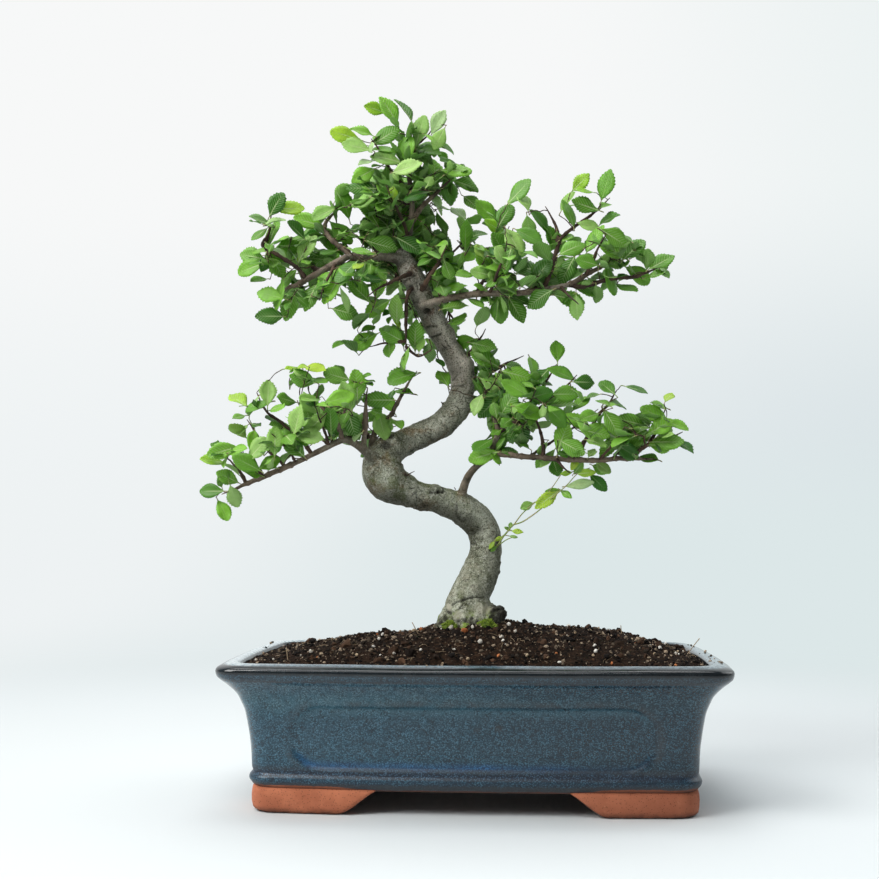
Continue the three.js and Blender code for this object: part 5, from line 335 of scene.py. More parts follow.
# ---- tables --------------------------------------------------------------
# Wood: name, then points x, y, z and radius from the limb's root to its tip.
LIMBS = [
    ("trunk", [(-4.5, 0, 100.6, 24), (-5, 0, 107, 21.2), (-5, 0, 114.1, 17), (-4.7, 1, 121.1, 14.3), (-2.9, 2, 127.6, 12.5), (-0.9, 3, 130.7, 12.4), (2.7, 5, 140.4, 12.1), (5.3, 7, 148.2, 10.8), (6.1, 8, 156.7, 10.3), (4.4, 8, 166.5, 10.5), (0.8, 6, 172.4, 10.8), (-4, 3, 176.9, 10.6), (-9.7, -1, 180.4, 10.1), (-15.4, -4, 183, 9.6), (-23.6, -8, 185.5, 8.9), (-31.7, -12, 187.3, 8.8), (-39.3, -15, 189.4, 9.5), (-46.8, -17, 192.6, 11.2), (-53.8, -18.5, 196.4, 13.5), (-58.4, -18, 202.2, 14.1), (-59.9, -16, 209.4, 12.9), (-57.8, -12, 215.5, 11.3), (-53, -8, 220, 10.1), (-46.3, -3, 224, 8.9), (-38.8, 2, 227.7, 8.6), (-30.5, 6, 232, 8.6), (-23.5, 10, 236.6, 8.9), (-17.6, 13, 241.9, 9), (-13, 15, 248.2, 8.7), (-10.4, 16, 255, 8.3), (-9.4, 16, 263.8, 7.9), (-9.6, 15, 271.1, 8.3), (-11.6, 13, 277.6, 8.9), (-14.8, 10.5, 283.4, 8), (-18.6, 8, 289.1, 7.3), (-21.9, 6, 294.9, 7.5), (-25.1, 4, 300.6, 7.9), (-28.6, 2, 306.7, 7.8), (-31.8, 0, 312.8, 7.6), (-34.6, -2, 319.1, 7.4), (-37.5, -4, 325.4, 7.4), (-40.4, -5, 331.7, 7.7), (-43.3, -6, 337.8, 7.4), (-46.3, -6, 343.3, 6.4), (-49, -6, 347.3, 5), (-50.3, -6, 350.1, 3.3)]),
    ("leader", [(-47.1, -5, 343.5, 5), (-46.5, -4, 350.5, 3.7), (-45.3, -3, 357.5, 2.93), (-43.8, -1, 366.1, 2.54), (-42.6, 1, 375.1, 2.21), (-42.5, 3, 383.5, 1.95), (-43.3, 4, 392.1, 1.75), (-44.4, 5, 402, 1.48), (-44.5, 6, 412, 1.29), (-43.9, 6, 421.7, 1.08), (-43.5, 5, 431.1, 0.88), (-43.1, 4, 440.4, 0.68)]),
    ("lead_r", [(-42.1, 1, 372.7, 1.87), (-39.1, 3, 378.7, 1.75), (-36, 6, 383.9, 1.62), (-29.6, 10, 391.5, 1.35), (-23.6, 13, 398.5, 1.09), (-17.6, 15, 404.6, 0.89), (-12.2, 16, 408.9, 0.68)]),
    ("lead_l", [(-43.3, 4, 390.7, 1.48), (-48.3, 0, 396.5, 1.34), (-54, -4, 402.9, 1.2), (-59, -8, 409.9, 1), (-63.4, -10, 418.2, 0.86), (-68.7, -11, 425.5, 0.66)]),
    ("lead_f", [(-44.6, -3, 361.5, 1.86), (-46.4, -12, 367.3, 1.58), (-49.6, -20, 373.8, 1.3), (-53.6, -26, 380.8, 1.04), (-56.4, -30, 387.6, 0.77)]),
    ("lead_b", [(-45.8, -4, 354.5, 2.13), (-43.1, 10, 364.8, 1.89), (-38.8, 24, 375.4, 1.58), (-34.9, 36, 386.3, 1.26), (-32.7, 44, 397.8, 0.92)]),
    ("top_r", [(-43.9, 6, 421.7, 0.95), (-38.6, 4, 426.5, 0.88), (-32.3, 1, 430.8, 0.74), (-28, -2, 435.2, 0.6)]),
    ("ul", [(-46.8, -8, 342.8, 5), (-51, -12, 344.3, 3.8), (-55, -14, 344.6, 3.1), (-60.5, -16, 344.7, 2.75), (-68, -19, 344, 2.48), (-74.9, -21, 343.8, 2.34), (-81.2, -23, 343.5, 2.27), (-89.4, -25, 338.8, 2.53), (-98.8, -27, 332.9, 2.33), (-108.4, -28, 327.3, 2.07), (-114.8, -28, 324.1, 1.61), (-120.2, -27, 322.5, 1.36), (-126, -26, 318.7, 1.04), (-131, -25, 315.1, 0.78)]),
    ("ul_a", [(-81.2, -23, 343.8, 1.95), (-82.3, -22, 346.4, 1.82), (-88.6, -18, 351.9, 1.64), (-97, -13, 360.5, 1.45), (-99.1, -9, 369, 1.26), (-95.9, -6, 375.9, 1.07), (-90.9, -4, 380.4, 0.87), (-86.3, -3, 384.7, 0.67)]),
    ("ul_b", [(-108.4, -28, 327.3, 1.55), (-110.8, -29, 331.7, 1.29), (-114.6, -30, 335.4, 1.23), (-120, -31, 339.2, 1.29), (-125.2, -31, 342.6, 1.23), (-132.1, -31, 346.9, 1.23), (-136.3, -30, 350.5, 1.55), (-134.3, -29, 355, 1.23), (-132.6, -28, 360.6, 0.91), (-132.3, -27, 366.8, 0.78), (-131.5, -26, 373.7, 0.59)]),
    ("ul_c", [(-98.8, -27, 332.9, 1.55), (-106.1, -19, 338.5, 1.31), (-113.7, -10, 345.4, 1.13), (-120.7, -2, 353.5, 0.94), (-125.3, 4, 361.9, 0.74)]),
    ("ul_d", [(-74.9, -21, 343.8, 1.69), (-82.1, -12, 342.4, 1.45), (-91.9, 0, 339.3, 1.27), (-101.2, 12, 335.2, 1.09), (-109, 22, 330.5, 0.83)]),
    ("ul_e", [(-89.4, -25, 338.8, 1.56), (-91.8, -34, 329.6, 1.28), (-94.5, -41, 319.7, 1.08), (-96.3, -45, 310.6, 0.82)]),
    ("ul_f", [(-60.5, -16, 344.7, 1.96), (-67.2, -4, 353.5, 1.73), (-77.4, 12, 363.2, 1.5), (-87.8, 27, 372.8, 1.25), (-97.9, 38, 381.6, 0.91)]),
    ("back_t", [(-41, 2, 333.2, 4), (-43.6, 16, 344.2, 3.1), (-47.8, 32, 357.1, 2.64), (-53.6, 48, 370.4, 2.13), (-59.9, 60, 383.8, 1.58), (-65.9, 68, 395.7, 1.09)]),
    ("back_m", [(-19, 14, 291.4, 3.7), (-21.2, 28, 302.1, 3), (-25.7, 44, 313.4, 2.52), (-31.6, 58, 324, 2), (-38.8, 68, 332.6, 1.44), (-46.6, 75, 339.3, 1.02)]),
    ("back_r", [(-10.6, 20, 259.6, 3.7), (-5, 34, 266.8, 3), (2.8, 48, 274.2, 2.52), (12.4, 60, 280.7, 1.99), (22.3, 69, 287, 1.43), (32.3, 75, 292.2, 1.01)]),
    ("back_l", [(-59.7, -6, 210.7, 3.9), (-67, 10, 221.2, 3.1), (-77.1, 26, 232, 2.59), (-88.8, 40, 241.7, 2.09), (-100.5, 52, 250, 1.55), (-111.9, 60, 256.7, 1.07)]),
    ("cen_f", [(-36.5, -4, 322.8, 2.91), (-33.8, -12, 324.4, 2.62), (-30.6, -20, 327.2, 2.2), (-25.4, -29, 332.3, 1.73), (-20.4, -37, 338.2, 1.33), (-16.3, -43, 345, 0.94)]),
    ("cen_l", [(-40.9, -7, 336.2, 2.51), (-42.8, -15, 333.1, 2.35), (-46.5, -24, 329.2, 1.94), (-52.7, -33, 324.1, 1.6), (-59.4, -41, 318.6, 1.26), (-66.2, -47, 312.3, 0.88)]),
    ("hang", [(-38.3, -6, 327, 1.98), (-42.7, -12, 322.5, 1.97), (-44.4, -14, 316.8, 1.7), (-44.6, -15, 308, 1.69), (-44.7, -15, 299.5, 1.56), (-44.8, -15, 290.9, 1.37), (-44.9, -15, 282.4, 0.97)]),
    ("hang_l", [(-44.8, -15, 288.9, 1.11), (-51.2, -15, 288, 1.04), (-59.2, -14, 287.9, 0.91), (-68.4, -13, 285.9, 0.65)]),
    ("hang_r", [(-44.9, -15, 285.6, 1.04), (-40.6, -16, 280.9, 0.97), (-35.3, -17, 278.7, 0.91), (-27.5, -18, 283, 0.71)]),
    ("ur", [(-35.5, -8, 313.2, 3.9), (-29.8, -13, 313.5, 3.1), (-23.7, -17, 314.6, 2.73), (-15.7, -20, 315.9, 2.52), (-7.2, -22, 316.7, 2.38), (1.2, -23, 317.6, 2.32), (10, -24, 317.7, 2.25), (18.6, -25, 317.2, 2.24), (27.2, -26, 317.1, 2.17), (37.1, -26, 318.1, 2.11), (47.7, -26, 319.6, 2.04), (55.6, -25, 321.3, 1.92), (62.5, -24, 323.3, 1.79), (67.8, -23, 326.5, 1.6), (71.7, -22, 329.2, 1.47), (78.9, -20, 333.5, 1.29), (85.8, -18, 337.1, 1.09), (91.4, -16, 340.1, 0.9), (97.7, -14, 343.1, 0.71)]),
    ("ur_a", [(44.1, -26, 319, 1.66), (46.6, -24, 324.7, 1.54), (49.5, -20, 333.9, 1.42), (52.6, -16, 344, 1.36), (54.7, -13, 352.6, 1.37), (54.5, -11, 359.1, 1.18), (53.1, -9, 364.7, 1.05), (50.1, -7, 372.3, 0.85), (46.3, -5, 379.6, 0.66)]),
    ("ur_a2", [(55, -13, 354, 1.24), (59.7, -10, 360, 1.11), (66, -7, 365, 1.05), (71.9, -4, 370, 0.99), (77.3, -2, 374.2, 0.86), (84, 0, 380.3, 0.73), (89.5, 2, 386.2, 0.6)]),
    ("ur_b", [(61.4, -24, 323.1, 1.53), (65.8, -24, 321.4, 1.47), (71.6, -23, 321.9, 1.41), (80.7, -21, 325.1, 1.28), (91.3, -19, 327.7, 1.22), (102.8, -16, 328.8, 1.1), (110.1, -14, 331.8, 0.97), (117.2, -12, 335.1, 0.84), (122.8, -10, 338.4, 0.65)]),
    ("ur_c", [(10, -24, 317.7, 1.8), (13, -33, 323.1, 1.52), (16.3, -41, 329.6, 1.26), (19.6, -47, 337.1, 1), (21.5, -51, 345.5, 0.74)]),
    ("ur_d", [(1.2, -23, 317.6, 1.93), (4.7, -9, 327.8, 1.64), (9, 6, 339.8, 1.4), (13.4, 20, 352.6, 1.23), (18.1, 31, 365.7, 1.04), (22.2, 38, 378, 0.77)]),
    ("ur_e", [(37.1, -26, 318.1, 1.66), (43.2, -12, 326.6, 1.43), (50.8, 2, 335.6, 1.26), (59.2, 15, 345.2, 1.08), (68.6, 26, 354.6, 0.82)]),
    ("ur_f", [(55.6, -25, 321.3, 1.41), (58.4, -34, 315.2, 1.2), (62.4, -42, 309.7, 0.94), (65.2, -47, 305.5, 0.68)]),
    ("ur_g", [(18.6, -25, 317.2, 1.54), (22.3, -15, 315.7, 1.36), (27.5, -3, 314.7, 1.12), (32.1, 8, 313.5, 0.87)]),
    ("ur_h", [(71.7, -22, 329.2, 1.22), (75.3, -28, 336.2, 1.08), (78.8, -33, 344, 0.89), (83.7, -36, 352.2, 0.69)]),
    ("kr", [(-33.7, -6, 328.3, 2.11), (-30, -2, 335.9, 1.86), (-25, 3, 343, 1.6), (-18.7, 9, 350.5, 1.35), (-11.5, 15, 358.7, 1.09), (-5.6, 20, 368.2, 0.82)]),
    ("mid_r", [(-11.6, 14, 279.1, 2.69), (-5.4, 10, 283.2, 2.14), (-0.5, 6, 288.6, 1.73), (3.6, 2, 293.9, 1.32), (7, -2, 298.5, 0.86)]),
    ("ll", [(-59.2, -22, 207.1, 4.8), (-63.1, -27, 211.3, 3.8), (-67.6, -30, 215.1, 3.3), (-71.4, -33, 218.2, 2.91), (-74.4, -35, 220.3, 2.65), (-78.4, -37, 222.3, 2.45), (-82.4, -38, 222.6, 2.26), (-86.4, -39, 220.9, 2.13), (-90.6, -39, 218.8, 2.07), (-100.9, -40, 213.6, 1.94), (-111.4, -40, 208.4, 1.82), (-121.9, -40, 203.9, 1.7), (-132.5, -39, 199.5, 1.57), (-138.4, -38, 197.3, 1.51), (-143.3, -38, 195.1, 1.39), (-149.8, -37, 192.7, 1.14), (-154.8, -36, 190.8, 0.88), (-159.8, -35, 189, 0.7)]),
    ("ll_a", [(-66.1, -24, 210.9, 3.2), (-69.8, -28, 218.3, 2.16), (-70, -29, 224.6, 1.91), (-68.9, -30, 232.1, 1.72), (-68.9, -30, 239.8, 1.53), (-69, -29, 246.9, 1.34), (-68.2, -27, 256.8, 0.96)]),
    ("ll_b", [(-64.9, -18, 212.6, 3.2), (-66.5, -18, 221, 2.06), (-64.7, -17, 228.8, 1.81), (-62.1, -15, 235.5, 1.62), (-54.9, -12, 240.9, 1.43), (-51.6, -10, 247, 1.3), (-48.5, -8, 253.8, 1.11), (-43.5, -6, 262.6, 0.92), (-38.4, -4, 270.8, 0.72)]),
    ("ll_c", [(-82.4, -38, 222.6, 1.76), (-83.5, -42, 228.6, 1.5), (-83, -45, 233.9, 1.25), (-80.1, -48, 239.2, 1.06), (-78, -50, 245.9, 0.81)]),
    ("ll_d", [(-143.3, -38, 195.1, 1.26), (-145.7, -37, 199.6, 1.14), (-149.2, -36, 204.7, 1.01), (-154.7, -35, 209.9, 0.82), (-160.1, -34, 213.2, 0.57)]),
    ("ll_e", [(-118.4, -40, 205.6, 1.26), (-122.9, -37, 211.5, 1.14), (-128.6, -34, 215.1, 1.01), (-134.5, -31, 221.6, 0.89), (-139.8, -28, 228.3, 0.83), (-146.4, -25, 237, 0.58)]),
    ("ll_f", [(-101.3, -40, 213.4, 1.38), (-106.1, -42, 220.5, 1.19), (-113, -43, 226.8, 1.07), (-119.8, -44, 233, 0.94), (-128.7, -44, 239.4, 0.82), (-133.5, -43, 246.5, 0.69), (-136.3, -42, 252.9, 0.57)]),
    ("ll_g", [(-90.6, -39, 218.8, 1.63), (-98.4, -28, 226.7, 1.4), (-106.2, -17, 234.9, 1.23), (-113.3, -7, 243.8, 0.99), (-118.9, 1, 252.8, 0.73)]),
    ("ll_h", [(-74.4, -35, 220.3, 1.89), (-83.2, -22, 229.1, 1.61), (-93.2, -8, 238.3, 1.38), (-102.7, 5, 247.7, 1.13), (-111.4, 16, 257.2, 0.81)]),
    ("ll_i", [(-90.6, -39, 218.8, 1.51), (-91.9, -48, 226.2, 1.24), (-93.8, -56, 233.5, 1.05), (-95.9, -62, 240.9, 0.79)]),
    ("ll_j", [(-111.4, -40, 208.4, 1.26), (-113.4, -50, 214.3, 1.05), (-117.5, -58, 219.3, 0.86), (-121.9, -64, 224.3, 0.61)]),
    ("ll_k", [(-132.5, -39, 199.5, 1.2), (-134.9, -46, 205.3, 1), (-138.6, -52, 210, 0.8), (-142.7, -56, 214, 0.55)]),
    ("lr", [(-9, -2, 180.7, 4.6), (-9.2, -4, 185.9, 3.5), (-8.1, -6, 192.3, 2.99), (-5.8, -8, 198.7, 2.72), (-3.1, -9, 203.2, 2.52), (1.8, -10, 208.3, 2.39), (7, -11, 212.1, 2.26), (10.9, -11, 217.9, 2.13), (12.8, -10, 223.8, 1.94), (14.8, -9, 229.7, 1.75), (12.8, -7, 237.7, 1.56), (9.5, -5, 245.8, 1.37), (6.9, -3, 254, 1.11), (5.6, -1, 260.8, 0.85)]),
    ("lr_h", [(7, -11, 212.1, 2.07), (14, -14, 215.1, 1.86), (20, -17, 214.4, 1.73), (26.6, -19, 213.4, 1.72), (34.6, -21, 212.5, 1.65), (42.4, -22, 212.1, 1.65), (51.6, -23, 211.1, 1.65), (61.6, -23, 210.4, 1.64), (69.8, -23, 210.2, 1.58), (78.5, -22, 210.4, 1.52), (87, -21, 211, 1.46), (95.5, -19, 211.5, 1.39), (104.9, -17, 211.2, 1.27), (112.7, -15, 211.1, 1.08), (115.3, -14, 212, 0.76)]),
    ("lr_a", [(43.4, -22, 212.1, 1.4), (43.8, -24, 218.6, 1.2), (42.8, -26, 225.5, 1.07), (40.3, -28, 232.9, 0.95), (36.6, -30, 241, 0.69)]),
    ("lr_b", [(61.6, -23, 210.4, 1.52), (67.3, -25, 217.8, 1.33), (72.4, -26, 226.6, 1.2), (76.1, -27, 234.7, 1.07), (80, -27, 240.3, 1.01), (84.1, -26, 244.4, 0.95), (87.7, -25, 250, 0.82), (91, -24, 254.8, 0.7)]),
    ("lr_c", [(14.8, -9, 229.7, 1.62), (22.6, -12, 233.9, 1.48), (31.6, -15, 238.7, 1.35), (39.9, -18, 242.9, 1.22), (46.9, -20, 247.1, 1.09), (55.8, -22, 255.1, 0.96), (65.3, -24, 264.1, 0.7)]),
    ("lr_d", [(31.6, -15, 238.7, 1.22), (36.8, -12, 247.4, 1.1), (43, -9, 257.1, 0.97), (48, -7, 265.6, 0.85), (53.3, -5, 274.4, 0.65)]),
    ("lr_e", [(98.4, -19, 211.4, 1.27), (104.8, -19, 216.8, 1.14), (110.4, -18, 220.7, 1.14), (114.7, -16, 227.8, 0.95), (118.9, -14, 236.3, 0.83), (122.4, -12, 244.2, 0.64)]),
    ("lr_f", [(110.4, -18, 220.7, 0.95), (117.8, -16, 223.4, 0.89), (125.6, -14, 225.4, 0.76), (132.3, -12, 228.7, 0.58)]),
    ("lr_g", [(34.6, -21, 212.5, 1.4), (42.5, -9, 218.5, 1.29), (51.9, 4, 225.4, 1.18), (62.3, 16, 233, 1.07), (72.9, 27, 240.7, 0.88), (82.3, 36, 249.1, 0.68)]),
    ("lr_h2", [(78.5, -22, 210.4, 1.26), (83.7, -32, 215.9, 1.06), (88.7, -40, 222.1, 0.93), (93.1, -46, 229, 0.67)]),
    ("lr_i", [(12.8, -10, 223.8, 1.55), (18.5, 2, 230.7, 1.45), (25.1, 15, 239.2, 1.27), (31.9, 27, 248.5, 1.09), (38.1, 37, 258.5, 0.82)]),
    ("lr_j", [(87, -21, 211, 1.2), (93.6, -10, 218.2, 1.09), (101.1, 1, 226.2, 0.91), (108.7, 11, 234.9, 0.73)]),
    ("lr_k", [(51.6, -23, 211.1, 1.08), (55.1, -30, 206.2, 0.94), (59.8, -36, 201.4, 0.75)]),
]

# Fine twigs: points x, y, z and radius, each from the wood or twig it springs from.
TWIGS = [
    [(53.3, -26.5, 208.6, 0.32), (51.8, -28.2, 211.6, 0.32)],
    [(52.5, -24.8, 209.8, 0.32), (52.7, -29.3, 213.2, 0.32), (51.9, -32.5, 216.1, 0.32), (52.6, -36.2, 218.7, 0.32), (52.1, -40.8, 221.7, 0.32)],
    [(108.7, 11, 234.9, 0.32), (106.3, 13.9, 234.9, 0.32), (102.8, 17, 234.1, 0.32), (100.4, 19.9, 232.8, 0.32), (97.4, 23.4, 231.7, 0.32)],
    [(106.5, 8.1, 232.4, 0.32), (106.2, 6.8, 236.7, 0.32), (106.1, 5.2, 241, 0.32)],
    [(101.1, 1, 226.2, 0.34), (106.9, -0.3, 225.1, 0.34), (108.7, 1.6, 223.4, 0.32), (110.2, 4.5, 220.9, 0.32)],
    [(97.9, -3.7, 222.7, 0.32), (96.2, -6.2, 225.6, 0.32), (94.7, -8.7, 228.7, 0.32)],
    [(96.8, -5.3, 221.6, 0.32), (99, -4.2, 218.9, 0.32), (102.8, -4, 214.9, 0.32)],
    [(93.6, -10, 218.2, 0.32), (90.8, -9.4, 221.2, 0.32), (86.2, -7.5, 223.5, 0.32)],
    [(89.8, -16.3, 214.1, 0.34), (91.2, -18.2, 217.2, 0.34), (93.4, -20.2, 220, 0.34), (93.6, -22.3, 221.7, 0.32)],
    [(35.4, 32.7, 254.2, 0.32), (40, 32.4, 253, 0.32), (44.2, 31.2, 253.1, 0.32), (48.1, 30.1, 252.2, 0.32)],
    [(35.4, 32.7, 254.2, 0.32), (36, 34.1, 251.3, 0.32)],
    [(31.9, 27, 248.5, 0.32), (30.6, 30.7, 247.3, 0.32), (30.2, 34.5, 246, 0.32), (29.9, 38.2, 243.4, 0.32), (28.3, 42.6, 241, 0.32)],
    [(29.3, 22.5, 245, 0.32), (25.1, 24.2, 245.1, 0.32), (19.3, 26.3, 245.5, 0.32)],
    [(29.3, 22.5, 245, 0.32), (33, 22.3, 244.5, 0.32), (36.1, 22, 244, 0.32)],
    [(24.3, 13.4, 238.1, 0.46), (28.4, 13.3, 234.7, 0.46), (32, 14.6, 232.5, 0.34), (33.2, 12, 231.9, 0.32)],
    [(28.4, 13.3, 234.7, 0.35), (29, 18.1, 231.6, 0.32)],
    [(23.4, 11.8, 237, 0.32), (20.3, 12.1, 239.3, 0.32), (17.3, 12.9, 240.5, 0.32), (13.8, 14, 242.5, 0.32)],
    [(23.4, 11.8, 237, 0.51), (27.3, 9.3, 238.9, 0.51), (31.1, 6.6, 241.3, 0.51), (34.4, 3.9, 244.1, 0.41), (37.1, 1.6, 246.6, 0.41), (35.9, 0.7, 251.1, 0.32)],
    [(37.1, 1.6, 246.6, 0.35), (41, 3.5, 249.5, 0.32), (44.3, 6.5, 252.1, 0.32)],
    [(31.1, 6.6, 241.3, 0.35), (35.4, 7.2, 242.2, 0.32), (39.1, 9, 243, 0.32)],
    [(20.2, 5.2, 232.8, 0.34), (18.2, 6.6, 232.7, 0.34), (14.9, 9.7, 229.4, 0.32), (12.4, 12.6, 225.8, 0.32)],
    [(18.5, 2, 230.7, 0.32), (23.8, -0.7, 233, 0.32)],
    [(15.3, -4.9, 226.7, 0.32), (12.4, -2.7, 226.4, 0.32), (10, 0.1, 226.2, 0.32), (7.2, 3.2, 225.1, 0.32), (4.4, 6.4, 224.3, 0.32)],
    [(93.1, -46, 229, 0.32), (96.4, -47.2, 226.9, 0.32), (100.3, -48.7, 223.3, 0.32)],
    [(88.7, -40, 222.1, 0.32), (90.8, -37.5, 221.4, 0.32)],
    [(88.7, -40, 222.1, 0.32), (88.1, -39.8, 223.2, 0.32)],
    [(83.7, -32, 215.9, 0.32), (85.1, -29.7, 217.9, 0.32), (85.8, -26.7, 221.5, 0.32)],
    [(55.8, 8.5, 228.2, 0.32), (59, 11.1, 227.2, 0.32), (62.9, 14, 225.7, 0.32)],
    [(54.5, 7, 227.3, 0.32), (53.7, 5.7, 231.8, 0.32), (52.9, 4.7, 236, 0.32)],
    [(53.2, 5.5, 226.3, 0.41), (55.1, 2.1, 229.4, 0.41), (56.6, -1.1, 233.3, 0.41), (58.9, -5.2, 236.3, 0.41), (57.3, -10.3, 236.7, 0.34), (57.7, -14.6, 238.3, 0.32), (60.2, -18.4, 238.8, 0.32), (61.3, -20.7, 240.3, 0.32)],
    [(35.7, -19.3, 213.4, 0.32), (36.4, -20.9, 216.5, 0.32)],
    [(125.6, -14, 225.4, 0.34), (125.7, -13.7, 223.5, 0.34), (123.4, -12.5, 220, 0.32)],
    [(123.7, -14.5, 224.9, 0.32), (124.8, -15.1, 228.9, 0.32), (125.4, -15.9, 233.3, 0.32)],
    [(123.7, -14.5, 224.9, 0.32), (122.9, -13.9, 226.2, 0.32)],
    [(115.9, -16.5, 222.7, 0.32), (114.8, -12.3, 222, 0.32), (113.4, -9.1, 220.8, 0.32), (112.2, -4.7, 219.7, 0.32)],
    [(122.4, -12, 244.2, 0.32), (125.6, -9.9, 243, 0.32)],
    [(117.8, -14.5, 234.2, 0.41), (118.9, -16.6, 235, 0.41), (121.2, -18.9, 235.7, 0.34), (121.4, -22.7, 240.7, 0.32), (119.6, -24.3, 245.3, 0.32)],
    [(114.7, -16, 227.8, 0.55), (111.8, -19.4, 230.2, 0.55), (110.8, -19.5, 230.9, 0.51), (106.9, -18.6, 233.5, 0.46), (104.2, -16.3, 236.3, 0.46), (101.1, -13.2, 239.2, 0.34), (98.8, -9.5, 239.6, 0.34), (96.5, -5.6, 240.4, 0.32), (94, -2.2, 239.2, 0.32), (90.8, 0.5, 239.2, 0.32), (89.6, 4.1, 238.7, 0.32)],
    [(104.2, -16.3, 236.3, 0.35), (104.5, -13.1, 236.3, 0.32), (106.1, -9.7, 235.6, 0.32)],
    [(114.7, -16, 227.8, 0.32), (113.4, -15.4, 228.7, 0.32)],
    [(114.7, -16, 227.8, 0.32), (115, -16.8, 227.4, 0.32)],
    [(113.6, -16.5, 226, 0.32), (113.6, -15.7, 226.1, 0.32)],
    [(112.5, -17, 224.3, 0.32), (115, -21.4, 224.3, 0.32)],
    [(108.5, -18.3, 219.4, 0.73), (108.1, -20, 219.5, 0.73), (107.1, -24.1, 221.7, 0.65), (106.3, -27.5, 224.1, 0.65), (102.1, -25.7, 226.5, 0.62), (99.8, -25.1, 229.6, 0.58), (95.9, -24.1, 230.4, 0.51), (92.6, -24, 229.7, 0.51), (92.6, -22.1, 230, 0.41), (92.1, -19.1, 228.9, 0.34), (95.6, -15.9, 227.4, 0.32), (98.1, -14.4, 225.8, 0.32)],
    [(92.6, -24, 229.7, 0.35), (87.8, -21.2, 232.2, 0.32)],
    [(99.8, -25.1, 229.6, 0.38), (98.4, -25.4, 232.3, 0.34), (92.6, -26.9, 235.3, 0.32)],
    [(108.1, -20, 219.5, 0.38), (110.1, -21.5, 221.3, 0.34), (109.8, -21.1, 222.3, 0.32)],
    [(100, -19, 212.7, 0.32), (101.9, -23.1, 210.5, 0.32)],
    [(51.2, -5.8, 270.9, 0.34), (49.8, -11.2, 271.8, 0.34), (53.4, -13.6, 272.2, 0.32)],
    [(46, -7.8, 262.2, 0.32), (45.8, -8.9, 263.4, 0.32)],
    [(45, -8.2, 260.5, 0.32), (46.2, -11.5, 259.7, 0.32)],
    [(43, -9, 257.1, 0.32), (41.8, -8.3, 261.4, 0.32), (40.9, -7.5, 264.8, 0.32), (39.1, -6.8, 269.1, 0.32), (38.1, -6.3, 273.4, 0.32), (36.7, -4.8, 276.4, 0.32), (34.7, -3.7, 281, 0.32)],
    [(43, -9, 257.1, 0.32), (47.6, -8.9, 253.2, 0.32)],
    [(41.8, -9.6, 255.2, 0.32), (41.2, -12.8, 257.7, 0.32), (41, -15.1, 259.2, 0.32)],
    [(40.5, -10.2, 253.3, 0.32), (42.4, -13.4, 253.4, 0.32)],
    [(38, -11.4, 249.4, 0.34), (34.8, -11.2, 251.8, 0.34), (32.5, -10.1, 254.6, 0.34), (27.6, -9.4, 257.1, 0.32)],
    [(32.5, -10.1, 254.6, 0.34), (32.1, -10.2, 258.5, 0.32), (31.5, -9.6, 261.6, 0.32)],
    [(38, -11.4, 249.4, 0.32), (36.3, -15.7, 250.7, 0.32), (34.5, -20.7, 252.6, 0.32)],
    [(63.7, -23.7, 262.6, 0.32), (66.4, -18.2, 259.9, 0.32)],
    [(60.5, -23, 259.6, 0.34), (60.6, -28.3, 259.1, 0.34), (61.3, -29.8, 254.7, 0.32)],
    [(49.9, -20.7, 249.8, 0.32), (47, -24.4, 251.9, 0.32)],
    [(43.4, -19, 245, 0.32), (43.9, -19.4, 245.9, 0.32)],
    [(43.4, -19, 245, 0.32), (43.8, -18.5, 245.5, 0.32)],
    [(39.9, -18, 242.9, 0.32), (41, -19.3, 237.4, 0.32)],
    [(35.8, -16.5, 240.8, 0.55), (34.6, -20.6, 237.5, 0.55), (31.4, -23.9, 233, 0.41), (29.2, -27.3, 233.2, 0.34), (26.6, -30.3, 233.3, 0.34), (25.2, -34.4, 235.6, 0.32), (25.2, -37.5, 237.2, 0.32), (23.7, -40.1, 239.9, 0.32), (23.6, -43.1, 242.5, 0.32)],
    [(31.4, -23.9, 233, 0.35), (28.6, -24, 229.5, 0.32)],
    [(34.6, -20.6, 237.5, 0.38), (33.8, -26.2, 237.3, 0.34), (33, -25.1, 240.1, 0.32)],
    [(33.7, -15.8, 239.8, 0.32), (33.6, -17, 240.9, 0.32)],
    [(28, -13.8, 236.8, 0.46), (29, -10.7, 235.3, 0.46), (27.5, -9.6, 236.2, 0.34), (27, -8.2, 240.1, 0.32)],
    [(29, -10.7, 235.3, 0.35), (33, -10.6, 232.3, 0.32), (36.3, -11.5, 229.8, 0.32)],
    [(26.2, -13.2, 235.8, 0.32), (24.2, -14.1, 241.1, 0.32)],
    [(26.2, -13.2, 235.8, 0.34), (26.2, -15, 233.2, 0.34), (22.1, -17.8, 228.7, 0.32)],
    [(24.4, -12.6, 234.9, 0.32), (24.3, -12.6, 235.6, 0.32)],
    [(18.7, -10.5, 231.8, 0.32), (17.6, -15.4, 233.2, 0.32)],
    [(91, -24, 254.8, 0.32), (92.9, -22.3, 257.5, 0.32)],
    [(87.7, -25, 250, 0.32), (84.2, -24.2, 251.5, 0.32), (81.2, -22.8, 252.1, 0.32)],
    [(84.1, -26, 244.4, 0.32), (86.3, -29.8, 246.9, 0.32), (89.9, -34, 248.6, 0.32)],
    [(84.1, -26, 244.4, 0.46), (83.4, -31.6, 246.2, 0.46), (81.6, -34.2, 245.1, 0.41), (79.7, -36.5, 242.6, 0.41), (81.2, -38.4, 240.1, 0.34), (86.4, -39.5, 241.3, 0.32)],
    [(80, -27, 240.3, 0.32), (79.8, -28.5, 239.2, 0.32)],
    [(74.2, -26.5, 230.6, 0.32), (72.1, -22.8, 232.6, 0.32), (69.8, -18.4, 233.1, 0.32), (67.1, -14.5, 234.6, 0.32)],
